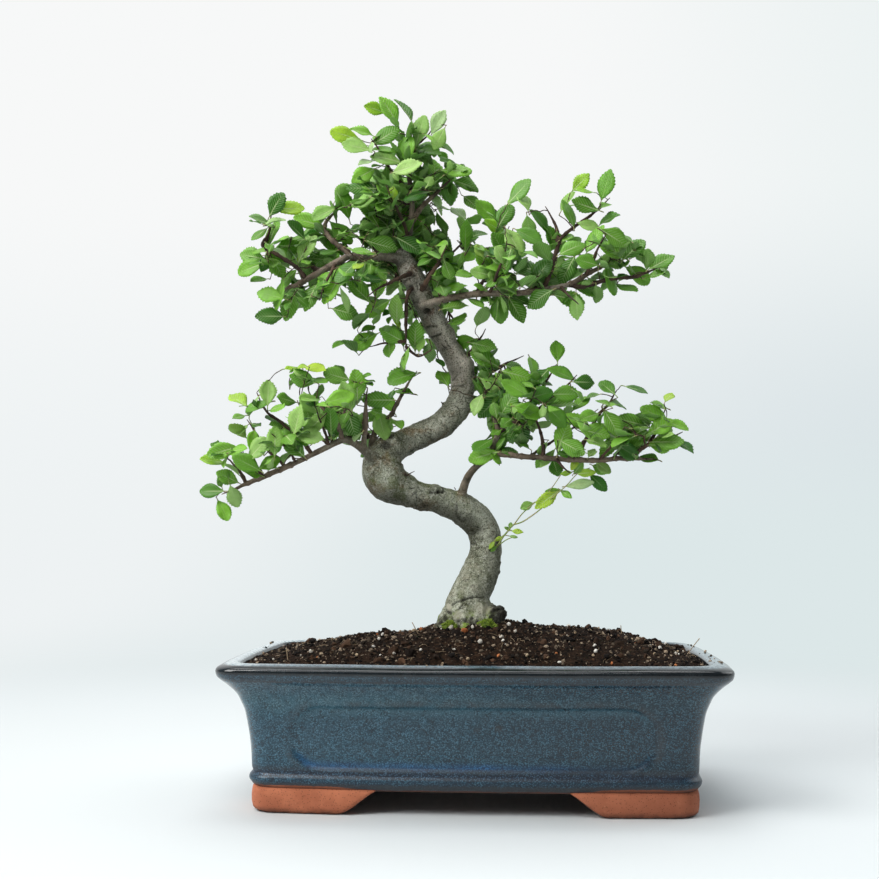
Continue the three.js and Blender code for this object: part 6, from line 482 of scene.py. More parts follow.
    [(74.2, -26.5, 230.6, 0.32), (72.2, -31.1, 231.1, 0.32), (71.3, -34.8, 231.7, 0.32), (68.9, -39.3, 231.8, 0.32)],
    [(73.3, -26.2, 228.6, 0.34), (75.4, -22.2, 228.5, 0.34), (80.1, -19.4, 228.2, 0.32)],
    [(71.3, -25.8, 224.8, 0.34), (68.1, -28, 227.2, 0.34), (63.7, -31, 229.6, 0.34), (60.4, -32.5, 233.7, 0.32), (57.5, -34, 237.7, 0.32), (55.3, -34.1, 241.2, 0.32)],
    [(67.3, -25, 217.8, 0.46), (65.4, -30.9, 218.6, 0.46), (66.7, -35.1, 220.1, 0.34), (68.3, -38.6, 221.9, 0.34), (71.6, -40.3, 221.8, 0.32)],
    [(64.4, -24, 214.1, 0.41), (63.3, -21.1, 216.7, 0.41), (61.7, -17.7, 218.1, 0.41), (60.4, -13.8, 218.5, 0.41), (61.8, -10.5, 216.6, 0.34), (63.1, -8.6, 213.8, 0.32)],
    [(61.8, -10.5, 216.6, 0.34), (63.6, -7.6, 218.5, 0.32), (65.4, -4.4, 221.7, 0.32), (66.7, -2.9, 224.2, 0.32)],
    [(63, -23.5, 212.2, 0.32), (61, -26.8, 212.2, 0.32)],
    [(36.6, -30, 241, 0.55), (34.9, -30.3, 244.6, 0.55), (36.8, -34, 248.5, 0.46), (38.8, -37.3, 248.1, 0.34), (41.8, -39.9, 245.7, 0.34), (43.5, -42.7, 244.1, 0.34), (43.2, -45.5, 244.6, 0.32)],
    [(36.8, -34, 248.5, 0.35), (39, -33.5, 254.2, 0.32)],
    [(34.9, -30.3, 244.6, 0.38), (31.8, -30.2, 247.3, 0.34), (31, -26.3, 248.3, 0.32)],
    [(42.8, -26, 225.5, 0.32), (42.3, -22.8, 227.1, 0.32), (42, -19.4, 228.9, 0.32), (41.9, -15.7, 230, 0.32)],
    [(43.1, -25.3, 223.2, 0.32), (47, -28.5, 222.6, 0.32)],
    [(112.7, -15, 211.1, 0.32), (115.3, -16.9, 210.8, 0.32), (118.4, -19.1, 209.3, 0.32)],
    [(87, -21, 211, 0.32), (87.6, -26, 210.4, 0.32)],
    [(69.8, -23, 210.2, 0.34), (70.3, -26.5, 210.4, 0.34), (70.7, -32, 210, 0.34)],
    [(20, -17, 214.4, 0.32), (20.4, -12.9, 213.9, 0.32)],
    [(18, -16, 214.6, 0.41), (17.4, -17.1, 215.2, 0.41), (16.9, -19.6, 216.2, 0.34), (15.1, -24.1, 215.1, 0.32)],
    [(12.3, -13.2, 214.3, 0.32), (11.4, -15.9, 215.4, 0.32)],
    [(8.7, -11.8, 212.8, 0.32), (11.2, -8.5, 212.9, 0.32), (14.4, -5, 212, 0.32)],
    [(5.6, -1, 260.8, 0.34), (7.4, -1.1, 264.1, 0.34), (9.4, -1.6, 267.7, 0.34), (11.4, -1.9, 270.4, 0.34), (10.6, -1.5, 274.4, 0.32), (9.8, -2.7, 277.6, 0.32)],
    [(5.6, -1, 260.8, 0.46), (5.2, 2.4, 263.8, 0.46), (5, 6.9, 267.5, 0.46), (3.7, 13.1, 268.1, 0.34), (6.1, 16.6, 267.2, 0.32), (8.4, 20.3, 267, 0.32), (11.4, 22.2, 265.3, 0.32)],
    [(5, 6.9, 267.5, 0.35), (8.1, 8.8, 272.2, 0.32), (10.4, 10, 276.4, 0.32)],
    [(5.6, -1, 260.8, 0.34), (3.3, -0.8, 263.8, 0.34), (1, -0.2, 266.9, 0.34), (-2.5, 1.5, 266.1, 0.32)],
    [(6, -1.7, 258.5, 0.32), (9, -0.6, 261.9, 0.32), (11.2, 0.8, 266.1, 0.32), (14.6, 2.1, 268.7, 0.32), (17.1, 4, 272.3, 0.32)],
    [(6.5, -2.3, 256.2, 0.58), (9.7, -5.7, 258.2, 0.58), (6.6, -8.4, 256.7, 0.34), (5.3, -12.6, 254.1, 0.32), (5.5, -16.4, 251.9, 0.32), (5.6, -20, 250.3, 0.32)],
    [(9.7, -5.7, 258.2, 0.38), (12.4, -9.8, 261.1, 0.34), (13.5, -14.3, 262.7, 0.32), (15.7, -17.4, 265.4, 0.32), (16.8, -21.6, 266.9, 0.32)],
    [(12.4, -9.8, 261.1, 0.34), (15.9, -11.1, 258.6, 0.32), (18.2, -12.1, 254.3, 0.32)],
    [(9.7, -5.7, 258.2, 0.38), (12.5, -7, 262.6, 0.34), (14.2, -8.3, 266.2, 0.34), (15.5, -7.8, 269.8, 0.32)],
    [(14.2, -8.3, 266.2, 0.34), (16.4, -11, 270.1, 0.32), (18.1, -13, 272.9, 0.32)],
    [(8.2, -4, 249.9, 0.41), (7.4, -2.2, 249.8, 0.41), (5.9, -2.7, 249, 0.32)],
    [(7.4, -2.2, 249.8, 0.35), (6.2, 0.6, 250.5, 0.32)],
    [(8.9, -4.5, 247.8, 0.32), (4.5, -4.9, 249.9, 0.32), (1.5, -5.2, 251.3, 0.32), (-2.7, -5.6, 253.7, 0.32), (-7.6, -5.3, 255.1, 0.32), (-11.7, -6.8, 256.9, 0.32), (-16.8, -6.6, 257.9, 0.32)],
    [(10.4, -5.5, 243.8, 0.32), (8.4, -6.1, 242.1, 0.32)],
    [(11.2, -6, 241.8, 0.51), (16.3, -1.9, 242.4, 0.51), (16, 0.9, 244.7, 0.41), (16, 3.7, 247.4, 0.41), (22.3, 4.8, 248.6, 0.32)],
    [(16, 3.7, 247.4, 0.35), (17.3, 7.3, 249.9, 0.32), (19.5, 11.7, 251.5, 0.32), (20.7, 14.3, 252.3, 0.32)],
    [(16.3, -1.9, 242.4, 0.35), (21, -5.4, 245.1, 0.32)],
    [(12, -6.5, 239.7, 0.32), (11.7, -9.6, 239, 0.32)],
    [(13.8, -8, 233.7, 0.32), (14.9, -12.6, 236.8, 0.32)],
    [(13.5, -9.7, 225.7, 0.32), (13, -10.8, 225.5, 0.32)],
    [(10.9, -11, 217.9, 0.32), (10.1, -14, 218.2, 0.32)],
    [(-141.4, -54.7, 212.7, 0.32), (-142.5, -51.4, 214.7, 0.32), (-143.7, -47.7, 216.7, 0.32), (-145, -44.9, 218.3, 0.32)],
    [(-140, -53.3, 211.3, 0.32), (-140.2, -56.7, 206.9, 0.32)],
    [(-135.8, -47.5, 206.5, 0.34), (-134.6, -52.4, 202.2, 0.34), (-131.7, -54.4, 200.7, 0.32), (-128.3, -56.6, 200.7, 0.32)],
    [(-133.7, -42.5, 202.4, 0.32), (-135.8, -39.7, 204, 0.32), (-138.7, -37.6, 205.8, 0.32)],
    [(-117.5, -58, 219.3, 0.32), (-120.9, -60.1, 217.3, 0.32), (-123.6, -63.1, 214.3, 0.32), (-126.5, -65.7, 210.9, 0.32)],
    [(-117.5, -58, 219.3, 0.32), (-117.6, -59.7, 216.2, 0.32), (-119.5, -62.1, 212.6, 0.32), (-120.1, -64.6, 208.2, 0.32)],
    [(-116.7, -56.4, 218.3, 0.41), (-115.5, -54.4, 224, 0.41), (-110.5, -56.7, 223.3, 0.34), (-109.1, -61.7, 221.6, 0.32)],
    [(-113.4, -50, 214.3, 0.34), (-111.9, -48.1, 218.5, 0.34), (-109.3, -49.8, 219.8, 0.32)],
    [(-113, -48, 213.1, 0.32), (-115.2, -49.5, 210.5, 0.32), (-117.2, -50.6, 207, 0.32), (-119.6, -51.9, 203.8, 0.32)],
    [(-112.2, -44, 210.8, 0.32), (-107.9, -46.2, 210.5, 0.32), (-102.7, -49, 209.1, 0.32)],
    [(-95.9, -62, 240.9, 0.32), (-96.4, -60, 244.5, 0.32), (-95.4, -57.4, 248.9, 0.32), (-95.4, -54.9, 253, 0.32), (-95.1, -52.2, 256.1, 0.32)],
    [(-95.9, -62, 240.9, 0.32), (-92, -64.8, 242, 0.32)],
    [(-93.8, -56, 233.5, 0.34), (-92.3, -54.9, 235.5, 0.34), (-88.7, -52.4, 239.6, 0.32)],
    [(-93.4, -54.4, 232.1, 0.32), (-97, -53.5, 234.2, 0.32), (-100.8, -52.6, 234.6, 0.32)],
    [(-91.4, -44.4, 223.2, 0.32), (-87.8, -48.6, 221.6, 0.32)],
    [(-99.6, 0.7, 244.6, 0.41), (-102.6, 1.9, 242.5, 0.41), (-105.4, 3.9, 240.4, 0.41), (-106.7, 4.3, 238.4, 0.34), (-110.8, 1.1, 236.4, 0.32)],
    [(-95.3, -5.1, 240.4, 0.32), (-94.1, -2.4, 238.2, 0.32), (-92.5, 1.6, 236.2, 0.32)],
    [(-95.3, -5.1, 240.4, 0.32), (-92.4, -5.7, 243.3, 0.32), (-89.5, -6.4, 244.8, 0.32)],
    [(-91, -11.1, 236.3, 0.34), (-88.5, -8.4, 235.7, 0.34), (-85.4, -4.7, 233.8, 0.34), (-82.5, -0.6, 232.7, 0.32)],
    [(-85.4, -4.7, 233.8, 0.34), (-81.1, -3.9, 233.5, 0.32), (-77.9, -5, 233.9, 0.32)],
    [(-85.4, -18.9, 231.2, 0.32), (-87.2, -16.7, 228.4, 0.32), (-88.1, -15.6, 224.5, 0.32)],
    [(-83.2, -22, 229.1, 0.34), (-82.7, -24.2, 233.8, 0.34), (-82.7, -23.9, 237.5, 0.32), (-82.5, -24.5, 240.6, 0.32)],
    [(-78.3, -29.2, 224.2, 0.34), (-78.3, -26.4, 222.5, 0.34), (-78.4, -23.4, 220, 0.34), (-77.7, -20.6, 221.9, 0.32)],
    [(-112.3, -8.4, 242.6, 0.32), (-112.4, -11.3, 247.5, 0.32)],
    [(-110.3, -11.3, 240, 0.32), (-113.4, -13.5, 240.8, 0.32), (-117.1, -16.4, 241.6, 0.32)],
    [(-106.2, -17, 234.9, 0.32), (-106.7, -14.4, 233.3, 0.32), (-106.7, -11.3, 230, 0.32), (-107.3, -7, 227.8, 0.32), (-107.3, -3.9, 224.1, 0.32)],
    [(-105.1, -18.6, 233.7, 0.46), (-111.3, -18.5, 231.6, 0.46), (-114.5, -21.4, 232.6, 0.34), (-117.2, -25.5, 232.7, 0.32), (-119.2, -29.3, 233.3, 0.32), (-121, -32.8, 233.9, 0.32)],
    [(-111.3, -18.5, 231.6, 0.35), (-112.4, -13.5, 228.2, 0.32)],
    [(-95.1, -32.7, 223.3, 0.32), (-90.9, -29.1, 227.2, 0.32)],
    [(-93.9, -34.3, 222.2, 0.32), (-95.7, -34.6, 222.2, 0.32)],
    [(-136.3, -42, 252.9, 0.32), (-133.1, -43.5, 255.8, 0.32), (-130, -46, 258.2, 0.32), (-126.6, -48.7, 260.3, 0.32), (-123, -51.4, 263.1, 0.32), (-119, -53.3, 265, 0.32)],
    [(-135.4, -42.3, 250.8, 0.32), (-134, -42.8, 251.1, 0.32)],
    [(-133.5, -43, 246.5, 0.32), (-135.6, -40.7, 245.1, 0.32), (-138.3, -37.8, 243.6, 0.32), (-141.6, -35.6, 241.2, 0.32), (-144, -32, 239.1, 0.32)],
    [(-132.3, -43.2, 244.7, 0.32), (-128.7, -45.4, 245.6, 0.32), (-123.5, -47.4, 246.4, 0.32)],
    [(-131.1, -43.5, 242.9, 0.32), (-134.9, -46.7, 242.5, 0.32), (-139.5, -49.4, 241.5, 0.32)],
    [(-128.7, -44, 239.4, 0.34), (-128.2, -47.7, 239.7, 0.34), (-127.6, -51.2, 240.5, 0.32)],
    [(-118.1, -43.8, 231.5, 0.32), (-121.5, -46.8, 227.4, 0.32)],
    [(-111.2, -42.8, 225.2, 0.34), (-112.1, -37, 225.3, 0.34), (-111.3, -36.8, 226.7, 0.32)],
    [(-109.5, -42.5, 223.6, 0.51), (-106.4, -42.6, 227.1, 0.51), (-103, -40.4, 228.4, 0.41), (-102.5, -36.9, 224.6, 0.34), (-102.3, -37, 223.9, 0.32)],
    [(-103, -40.4, 228.4, 0.35), (-99.7, -37.7, 229.8, 0.32), (-97, -35.8, 230.6, 0.32)],
    [(-106.4, -42.6, 227.1, 0.35), (-105.9, -44.1, 229.4, 0.32)],
    [(-103.7, -41, 216.9, 0.32), (-101.9, -45.9, 218.3, 0.32), (-99.4, -51, 218.8, 0.32)],
    [(-139.8, -28, 228.3, 0.46), (-140.5, -31, 230.7, 0.46), (-141.3, -34.5, 233.7, 0.46), (-141.9, -35.9, 233.4, 0.41), (-141.1, -41.6, 233, 0.34), (-138.6, -44.1, 231.3, 0.32), (-136.5, -46.5, 229.5, 0.32)],
    [(-141.3, -34.5, 233.7, 0.35), (-142, -38.4, 236.4, 0.32)],
    [(-137.1, -29.5, 224.9, 0.32), (-139.5, -25.2, 220.5, 0.32)],
    [(-137.1, -29.5, 224.9, 0.32), (-140.3, -32.4, 224.6, 0.32), (-142.7, -35.2, 222.7, 0.32)],
    [(-134.5, -31, 221.6, 0.32), (-135.2, -34.7, 221.3, 0.32), (-137.3, -37.9, 221.6, 0.32)],
    [(-131.6, -32.5, 218.3, 0.41), (-132.8, -37, 219.7, 0.41), (-132.1, -41.5, 217, 0.34), (-135.4, -39.6, 212.6, 0.32)],
    [(-119.9, -39, 207.6, 0.32), (-120.3, -39.2, 206.4, 0.32)],
    [(-160.1, -34, 213.2, 0.32), (-165.6, -37.1, 215, 0.32)],
    [(-156.5, -34.7, 211, 0.34), (-155.3, -37.9, 212.5, 0.34), (-153.9, -42.2, 214.1, 0.34), (-153.5, -46.7, 214.1, 0.32), (-152.8, -50.7, 213.3, 0.32)],
    [(-151, -35.7, 206.5, 0.32), (-152.2, -40, 206.5, 0.32)],
    [(-145.7, -37, 199.6, 0.32), (-147.4, -33.6, 199.3, 0.32)],
    [(-78.7, -49.3, 243.7, 0.32), (-79.5, -45, 244.9, 0.32), (-80.3, -40.3, 245.4, 0.32)],
    [(-80.1, -48, 239.2, 0.41), (-77.7, -52.2, 237.8, 0.41), (-73.8, -55.7, 236, 0.41), (-73.9, -59.2, 237.6, 0.34), (-75.1, -62.2, 239.2, 0.34), (-77.8, -66.8, 239.6, 0.32), (-80, -71.1, 240.1, 0.32), (-82.7, -74.5, 239.4, 0.32), (-84.5, -78.1, 238.7, 0.32)],
    [(-81.1, -47, 237.5, 0.46), (-83.9, -42.5, 240.2, 0.46), (-87.5, -42.7, 238.8, 0.41), (-87.4, -39.7, 239.9, 0.32)],
    [(-87.5, -42.7, 238.8, 0.35), (-90.3, -40.7, 238.8, 0.32)],
    [(-83.5, -42, 228.6, 0.32), (-84.8, -36.7, 229.4, 0.32)],
    [(-40.9, -5, 266.7, 0.32), (-37.9, -7.9, 267.8, 0.32), (-35.2, -10.7, 268.6, 0.32)],
    [(-46.5, -7.2, 257.3, 0.32), (-48.2, -9.7, 258.1, 0.32), (-51.8, -12, 258.7, 0.32)],
    [(-47.5, -7.6, 255.6, 0.32), (-43.4, -7.7, 255.4, 0.32), (-37.6, -8.2, 254.1, 0.32)],
    [(-53.8, -11.3, 243, 0.32), (-53.4, -14.5, 245.3, 0.32), (-51.1, -17.7, 248, 0.32), (-50.1, -20.5, 249.2, 0.32)],
    [(-54.9, -12, 240.9, 0.32), (-51.1, -11.3, 239.8, 0.32)],
    [(-56.7, -12.8, 239.6, 0.32), (-54.9, -12.8, 239, 0.32)],
    [(-58.5, -13.5, 238.2, 0.32), (-56.4, -17.8, 238.5, 0.32), (-54.4, -22.2, 238.4, 0.32)],
    [(-58.5, -13.5, 238.2, 0.34), (-61.1, -15.3, 241.5, 0.34), (-63.1, -17.1, 245.1, 0.34), (-66.7, -17.8, 244.2, 0.32), (-71, -18.6, 243.1, 0.32)],
    [(-64.7, -17, 228.8, 0.32), (-67.7, -17.5, 231.5, 0.32), (-70.4, -17.9, 233.8, 0.32)],
    [(-68.2, -27, 256.8, 0.34), (-70.3, -30.6, 258.5, 0.34), (-72.8, -34.4, 259.3, 0.34), (-76, -37.8, 259.7, 0.32)],
    [(-72.8, -34.4, 259.3, 0.34), (-71.3, -38, 258.4, 0.32)],
    [(-68.2, -27, 256.8, 0.46), (-71.6, -26.9, 259.4, 0.46), (-74.6, -27.4, 262.5, 0.46), (-79.2, -23.9, 260.2, 0.41), (-81.9, -25.9, 264.9, 0.32)],
    [(-79.2, -23.9, 260.2, 0.35), (-82, -20.4, 256.4, 0.32), (-84.2, -17.4, 254.6, 0.32), (-86, -14.5, 251.4, 0.32)],
    [(-68.9, -29.3, 244.6, 0.32), (-74, -32.3, 245.1, 0.32)],
    [(-69.3, -29.7, 229.6, 0.32), (-69.1, -34, 229.7, 0.32), (-68.7, -37.7, 228.4, 0.32)],
    [(-157.3, -35.5, 189.9, 0.34), (-158.7, -37.1, 191, 0.34), (-159.9, -39.6, 189.3, 0.32), (-161.5, -42.4, 186.7, 0.32)],
    [(-149.8, -37, 192.7, 0.34), (-151.2, -41.4, 191.7, 0.34), (-153, -46.6, 189.9, 0.32)],
    [(-151.2, -41.4, 191.7, 0.34), (-151.4, -46.2, 193.5, 0.32), (-151.6, -49.8, 195.7, 0.32)],
    [(-147.7, -37.3, 193.5, 0.32), (-147.1, -35.2, 194.8, 0.32)],
    [(-130.4, -39.2, 200.3, 0.32), (-131, -41.4, 199.2, 0.32)],
    [(-88.5, -39, 219.9, 0.85), (-89.9, -37.7, 224.8, 0.85), (-91.6, -36, 229, 0.85), (-90.9, -36.5, 233.4, 0.83), (-91.3, -32.8, 236, 0.8), (-92.9, -32, 239.5, 0.78), (-93.9, -32.2, 242.7, 0.78), (-96.9, -30.5, 245.5, 0.71), (-100.2, -28.9, 246.6, 0.71), (-101.6, -29.9, 249.5, 0.65), (-104, -31.5, 251.8, 0.65), (-104.7, -34.6, 254.7, 0.62), (-104.7, -38, 257.6, 0.62), (-107.6, -40.2, 259.3, 0.55), (-108.7, -42.1, 256.7, 0.46), (-109.1, -43.1, 252.4, 0.46), (-108.2, -44.1, 248.4, 0.46), (-106.9, -48.6, 247.1, 0.34), (-106.7, -51.4, 247.9, 0.34), (-106, -55.7, 248, 0.32)],
    [(-106.7, -51.4, 247.9, 0.34), (-105.4, -54.2, 251.4, 0.32), (-104, -56.3, 255.4, 0.32), (-102.9, -57.6, 259, 0.32), (-101.3, -58.8, 262.6, 0.32), (-100, -59.4, 266, 0.32)],
    [(-108.2, -44.1, 248.4, 0.35), (-109.3, -42.8, 245.1, 0.32)],
    [(-107.6, -40.2, 259.3, 0.38), (-110.5, -43.6, 262.1, 0.34), (-114.3, -44.8, 262.3, 0.34), (-115.2, -46, 258.6, 0.32), (-114.8, -45.5, 254.1, 0.32)],
    [(-104.7, -38, 257.6, 0.35), (-105.2, -38.2, 261.8, 0.32), (-107.3, -37.4, 265.5, 0.32), (-108.6, -36.1, 268.6, 0.32)],
    [(-104.7, -38, 257.6, 0.35), (-104.4, -39.9, 259.8, 0.32)],
    [(-100.2, -28.9, 246.6, 0.35), (-103.7, -25.8, 244.4, 0.32), (-105.1, -23.9, 242.4, 0.32)],
    [(-93.9, -32.2, 242.7, 0.38), (-93.5, -31.1, 246.7, 0.34), (-93, -29.1, 249.6, 0.32)],
    [(-93.5, -31.1, 246.7, 0.34), (-95.9, -35.1, 250.3, 0.32)],
    [(-91.3, -32.8, 236, 0.35), (-91.5, -28.4, 236.5, 0.32)],
    [(2.2, 3.3, 292.1, 0.32), (2, -0.5, 293.5, 0.32), (0.3, -4.1, 295.1, 0.32), (0.2, -7.5, 297.1, 0.32)],
    [(2.2, 3.3, 292.1, 0.32), (1.5, 6.1, 293.5, 0.32)],
    [(0.8, 4.7, 290.4, 0.32), (-2.5, 2.1, 290.3, 0.32), (-5.4, -1, 289.9, 0.32)],
    [(-0.5, 6, 288.6, 0.32), (-1.6, 8.6, 290.8, 0.32), (-2.7, 11.3, 293.6, 0.32)],
    [(-3, 8, 285.9, 0.32), (-1.7, 11.9, 283.9, 0.32), (0.4, 16, 280.7, 0.32), (2.9, 19.8, 278.1, 0.32)],
    [(-4.2, 9, 284.6, 0.32), (-4.5, 12.4, 285.4, 0.32), (-6.2, 17, 286.1, 0.32), (-6.7, 21.3, 286, 0.32), (-6.9, 25.6, 286.7, 0.32)],
    [(-5.4, 10, 283.2, 0.32), (-5.7, 5.4, 281.7, 0.32)],
    [(-5.6, 20, 368.2, 0.32), (-6.5, 25, 368.3, 0.32), (-6.6, 29.6, 367.8, 0.32), (-8.2, 35.4, 366.9, 0.32)],
    [(-5.6, 20, 368.2, 0.32), (-5.2, 20.6, 373, 0.32), (-5.5, 21.6, 377, 0.32)],
    [(-6.6, 19.2, 366.6, 0.32), (-3.6, 19.5, 364.8, 0.32), (-1.3, 19.9, 362.5, 0.32)],
    [(-7.6, 18.3, 365, 0.34), (-9, 15.6, 369.1, 0.34), (-10, 14.8, 372.9, 0.32)],
    [(-10.6, 15.8, 360.3, 0.32), (-13.1, 20.5, 363.9, 0.32)],
    [(-11.5, 15, 358.7, 0.55), (-10.1, 11.8, 356.9, 0.55), (-8.2, 7.6, 355.2, 0.55), (-7.7, 2.5, 357.4, 0.51), (-7.9, -1.1, 360.4, 0.51), (-6.1, -4.7, 359.2, 0.41), (-4.4, -8, 357.4, 0.41), (-3.9, -12, 354.7, 0.34), (-2.5, -15, 352.5, 0.34), (-2.9, -17.5, 350, 0.34), (-6.2, -16, 344.4, 0.32)],
    [(-7.9, -1.1, 360.4, 0.35), (-8.5, 0, 363.7, 0.32), (-8.2, 1.4, 366.9, 0.32)],
    [(-8.2, 7.6, 355.2, 0.35), (-7.2, 3.7, 352.8, 0.32)],
    [(-16.3, 11, 353.2, 0.34), (-18.9, 15.2, 355.8, 0.34), (-21.4, 19, 357.7, 0.34), (-23.1, 22, 357.3, 0.32), (-23.9, 25.9, 356.1, 0.32)],
    [(-16.3, 11, 353.2, 0.32), (-18.4, 9.3, 355.5, 0.32), (-20.9, 6.3, 358.4, 0.32)],
    [(-16.3, 11, 353.2, 0.55), (-17.8, 14.7, 350.7, 0.55), (-17.6, 18.5, 350.5, 0.51), (-17.4, 22.5, 349.8, 0.51), (-20.2, 23.8, 347.1, 0.41), (-22.5, 23.1, 342.9, 0.41), (-26.2, 23.6, 339.4, 0.34), (-29.8, 24.7, 336.8, 0.34), (-32.7, 27, 335.8, 0.34), (-35.4, 27.9, 334.4, 0.32)],
    [(-32.7, 27, 335.8, 0.34), (-35.3, 30.5, 336.2, 0.32)],
    [(-17.4, 22.5, 349.8, 0.38), (-16.5, 26.5, 351.2, 0.34), (-12.9, 26.1, 352.6, 0.32), (-9.5, 23.4, 353.3, 0.32)],
    [(-18.7, 9, 350.5, 0.32), (-17.5, 11.3, 348.7, 0.32)],
    [(-19.9, 7.8, 349, 0.32), (-17, 6.1, 347.2, 0.32), (-14.9, 2.7, 345.3, 0.32)],
    [(-23.7, 4.2, 344.5, 0.32), (-25.2, 7.7, 345, 0.32), (-27.6, 10.6, 345.4, 0.32)],
    [(-23.7, 4.2, 344.5, 0.34), (-23.8, 1.2, 346.2, 0.34), (-22.4, -2.8, 348, 0.32)],
    [(-23.8, 1.2, 346.2, 0.34), (-26, -3.2, 347.7, 0.32), (-29.1, -6.1, 348.3, 0.32)],
    [(-23.7, 4.2, 344.5, 0.32), (-21.2, 0, 343.3, 0.32)],
    [(-23.7, 4.2, 344.5, 0.32), (-23.3, 4.3, 344.8, 0.32)],
    [(-27, 1, 340.2, 0.32), (-29.4, 2.7, 341.4, 0.32), (-32.2, 4.8, 342.3, 0.32)],
    [(-28, 0, 338.7, 0.32), (-26, -1.8, 339.6, 0.32)],
    [(-29, -1, 337.3, 0.32), (-29.2, -1.3, 334, 0.32), (-28.8, -1.8, 329.3, 0.32), (-28.5, -1.7, 325.9, 0.32), (-28.1, -1.7, 321.2, 0.32)],
    [(-29, -1, 337.3, 0.32), (-30.7, 1.9, 337, 0.32), (-32.6, 5.6, 336.5, 0.32)],
    [(-29, -1, 337.3, 0.41), (-27.4, -2.2, 337.5, 0.41), (-23.1, -6.7, 335.4, 0.34), (-20.7, -11.4, 336, 0.32), (-19.9, -16.1, 337.6, 0.32)],
    [(83.7, -36, 352.2, 0.32), (78.5, -35.1, 356.2, 0.32)],
    [(80, -33.8, 346, 0.34), (76.6, -35.2, 347.1, 0.34), (72.3, -36.7, 347.6, 0.32)],
    [(76.6, -35.2, 347.1, 0.34), (72.9, -33.6, 345, 0.32), (70, -31.1, 343.9, 0.32), (67.8, -27.8, 341.9, 0.32)],
    [(75.3, -28, 336.2, 0.32), (77.3, -30.7, 334.3, 0.32), (80.8, -33.8, 331.6, 0.32)],
    [(74.4, -26.5, 334.5, 0.32), (76.3, -21.6, 338.3, 0.32)],
    [(31.4, 6.2, 313.7, 0.32), (35.7, 5.9, 315.7, 0.32), (38.8, 6.6, 316.8, 0.32)],
    [(25.8, -7, 315.1, 0.32), (24.6, -5.6, 318, 0.32), (23.6, -4.7, 321.2, 0.32)],
    [(22.3, -15, 315.7, 0.32), (23.5, -14.5, 313.6, 0.32)],
    [(20.1, -21, 316.6, 0.34), (20.5, -22.1, 317.5, 0.34), (20.6, -22.9, 318.4, 0.32)],
    [(58.4, -34, 315.2, 0.32), (55.6, -34.9, 316.7, 0.32), (52.3, -36.2, 317.8, 0.32)],
    [(60.4, 16.4, 346.4, 0.32), (62.8, 13.4, 346.7, 0.32), (65, 8.4, 347.9, 0.32)],
    [(58.3, 13.6, 344.1, 0.32), (62.2, 13.7, 342.2, 0.32), (66.1, 14.4, 340.9, 0.32), (69.4, 14.4, 338.5, 0.32), (73.6, 14.4, 336.3, 0.32), (78.3, 15.2, 333.7, 0.32), (82.3, 15.4, 331.4, 0.32)],
    [(56.4, 10.7, 342, 0.32), (56.2, 9.5, 345.8, 0.32)],
    [(55.5, 9.2, 340.9, 0.34), (56.1, 6.9, 344.3, 0.34), (57.1, 4, 347, 0.34), (60, 4.1, 344.6, 0.32)],
    [(52.6, 4.9, 337.7, 0.51), (53.1, 2.2, 341.3, 0.51), (54.4, -1.3, 345, 0.51), (54.5, -2.6, 344.2, 0.34), (53, -6.6, 347.1, 0.32)],
    [(54.4, -1.3, 345, 0.38), (52, -0.4, 348, 0.34), (49.6, 1.9, 350.7, 0.34), (49.2, 5.9, 353.1, 0.32), (49.1, 9.4, 354.7, 0.32), (49.9, 12.8, 355, 0.32)],
    [(51.7, 3.4, 336.6, 0.41), (49, 5.9, 336.5, 0.41), (46.7, 9.7, 336, 0.41), (43.1, 13.2, 336, 0.41), (42.8, 16.5, 335.9, 0.32), (44.1, 20, 335.9, 0.32)],
    [(43.1, 13.2, 336, 0.35), (41, 13.8, 339.8, 0.32), (40.2, 14, 343.5, 0.32)],
    [(51.7, 3.4, 336.6, 0.32), (54.4, 2.1, 336, 0.32), (57.7, -0.8, 335.1, 0.32), (60.7, -3.1, 334, 0.32)],
    [(46.5, -5.8, 330.6, 0.34), (42.3, -4.4, 330.9, 0.34), (43.3, -0.7, 329.3, 0.32)],
    [(45.7, -7.3, 329.6, 0.32), (48.5, -6.2, 327.2, 0.32), (50.2, -3.8, 323, 0.32)],
    [(43.2, -12, 326.6, 0.32), (46.1, -12.1, 325.1, 0.32), (49.1, -12.4, 323, 0.32)],
    [(43.2, -12, 326.6, 0.32), (46, -14.8, 328.7, 0.32)],
    [(40.1, -19, 322.4, 0.32), (42.6, -20.5, 324.4, 0.32)],
    [(40.1, -19, 322.4, 0.32), (37, -18.6, 323.6, 0.32)],
    [(39.4, -20.8, 321.3, 0.41), (36.5, -18.5, 321.3, 0.41), (33.4, -13.2, 322.3, 0.34), (34.3, -8.9, 321.5, 0.32), (35.8, -5.6, 320.2, 0.32)],
    [(19.3, 33, 369.2, 0.32), (15, 32.2, 371.6, 0.32)],
    [(15.2, 24.1, 357.5, 0.55), (16.6, 21.6, 361.4, 0.55), (20.2, 20.2, 363.9, 0.51), (21.2, 16.6, 366.3, 0.46), (22.1, 13.2, 367.6, 0.46), (19.4, 10.9, 369.3, 0.41), (20.7, 10.6, 375.2, 0.34), (17.2, 10.4, 379.1, 0.32), (12.7, 9.9, 382.2, 0.32)],
    [(19.4, 10.9, 369.3, 0.35), (16.1, 9.6, 370.6, 0.32)],
    [(20.2, 20.2, 363.9, 0.35), (24.1, 20, 365.9, 0.32)],
    [(14.6, 22.8, 355.9, 0.34), (15.5, 23.9, 354.8, 0.34), (19.5, 27.9, 353.7, 0.32), (23.3, 31.7, 353.5, 0.32)],
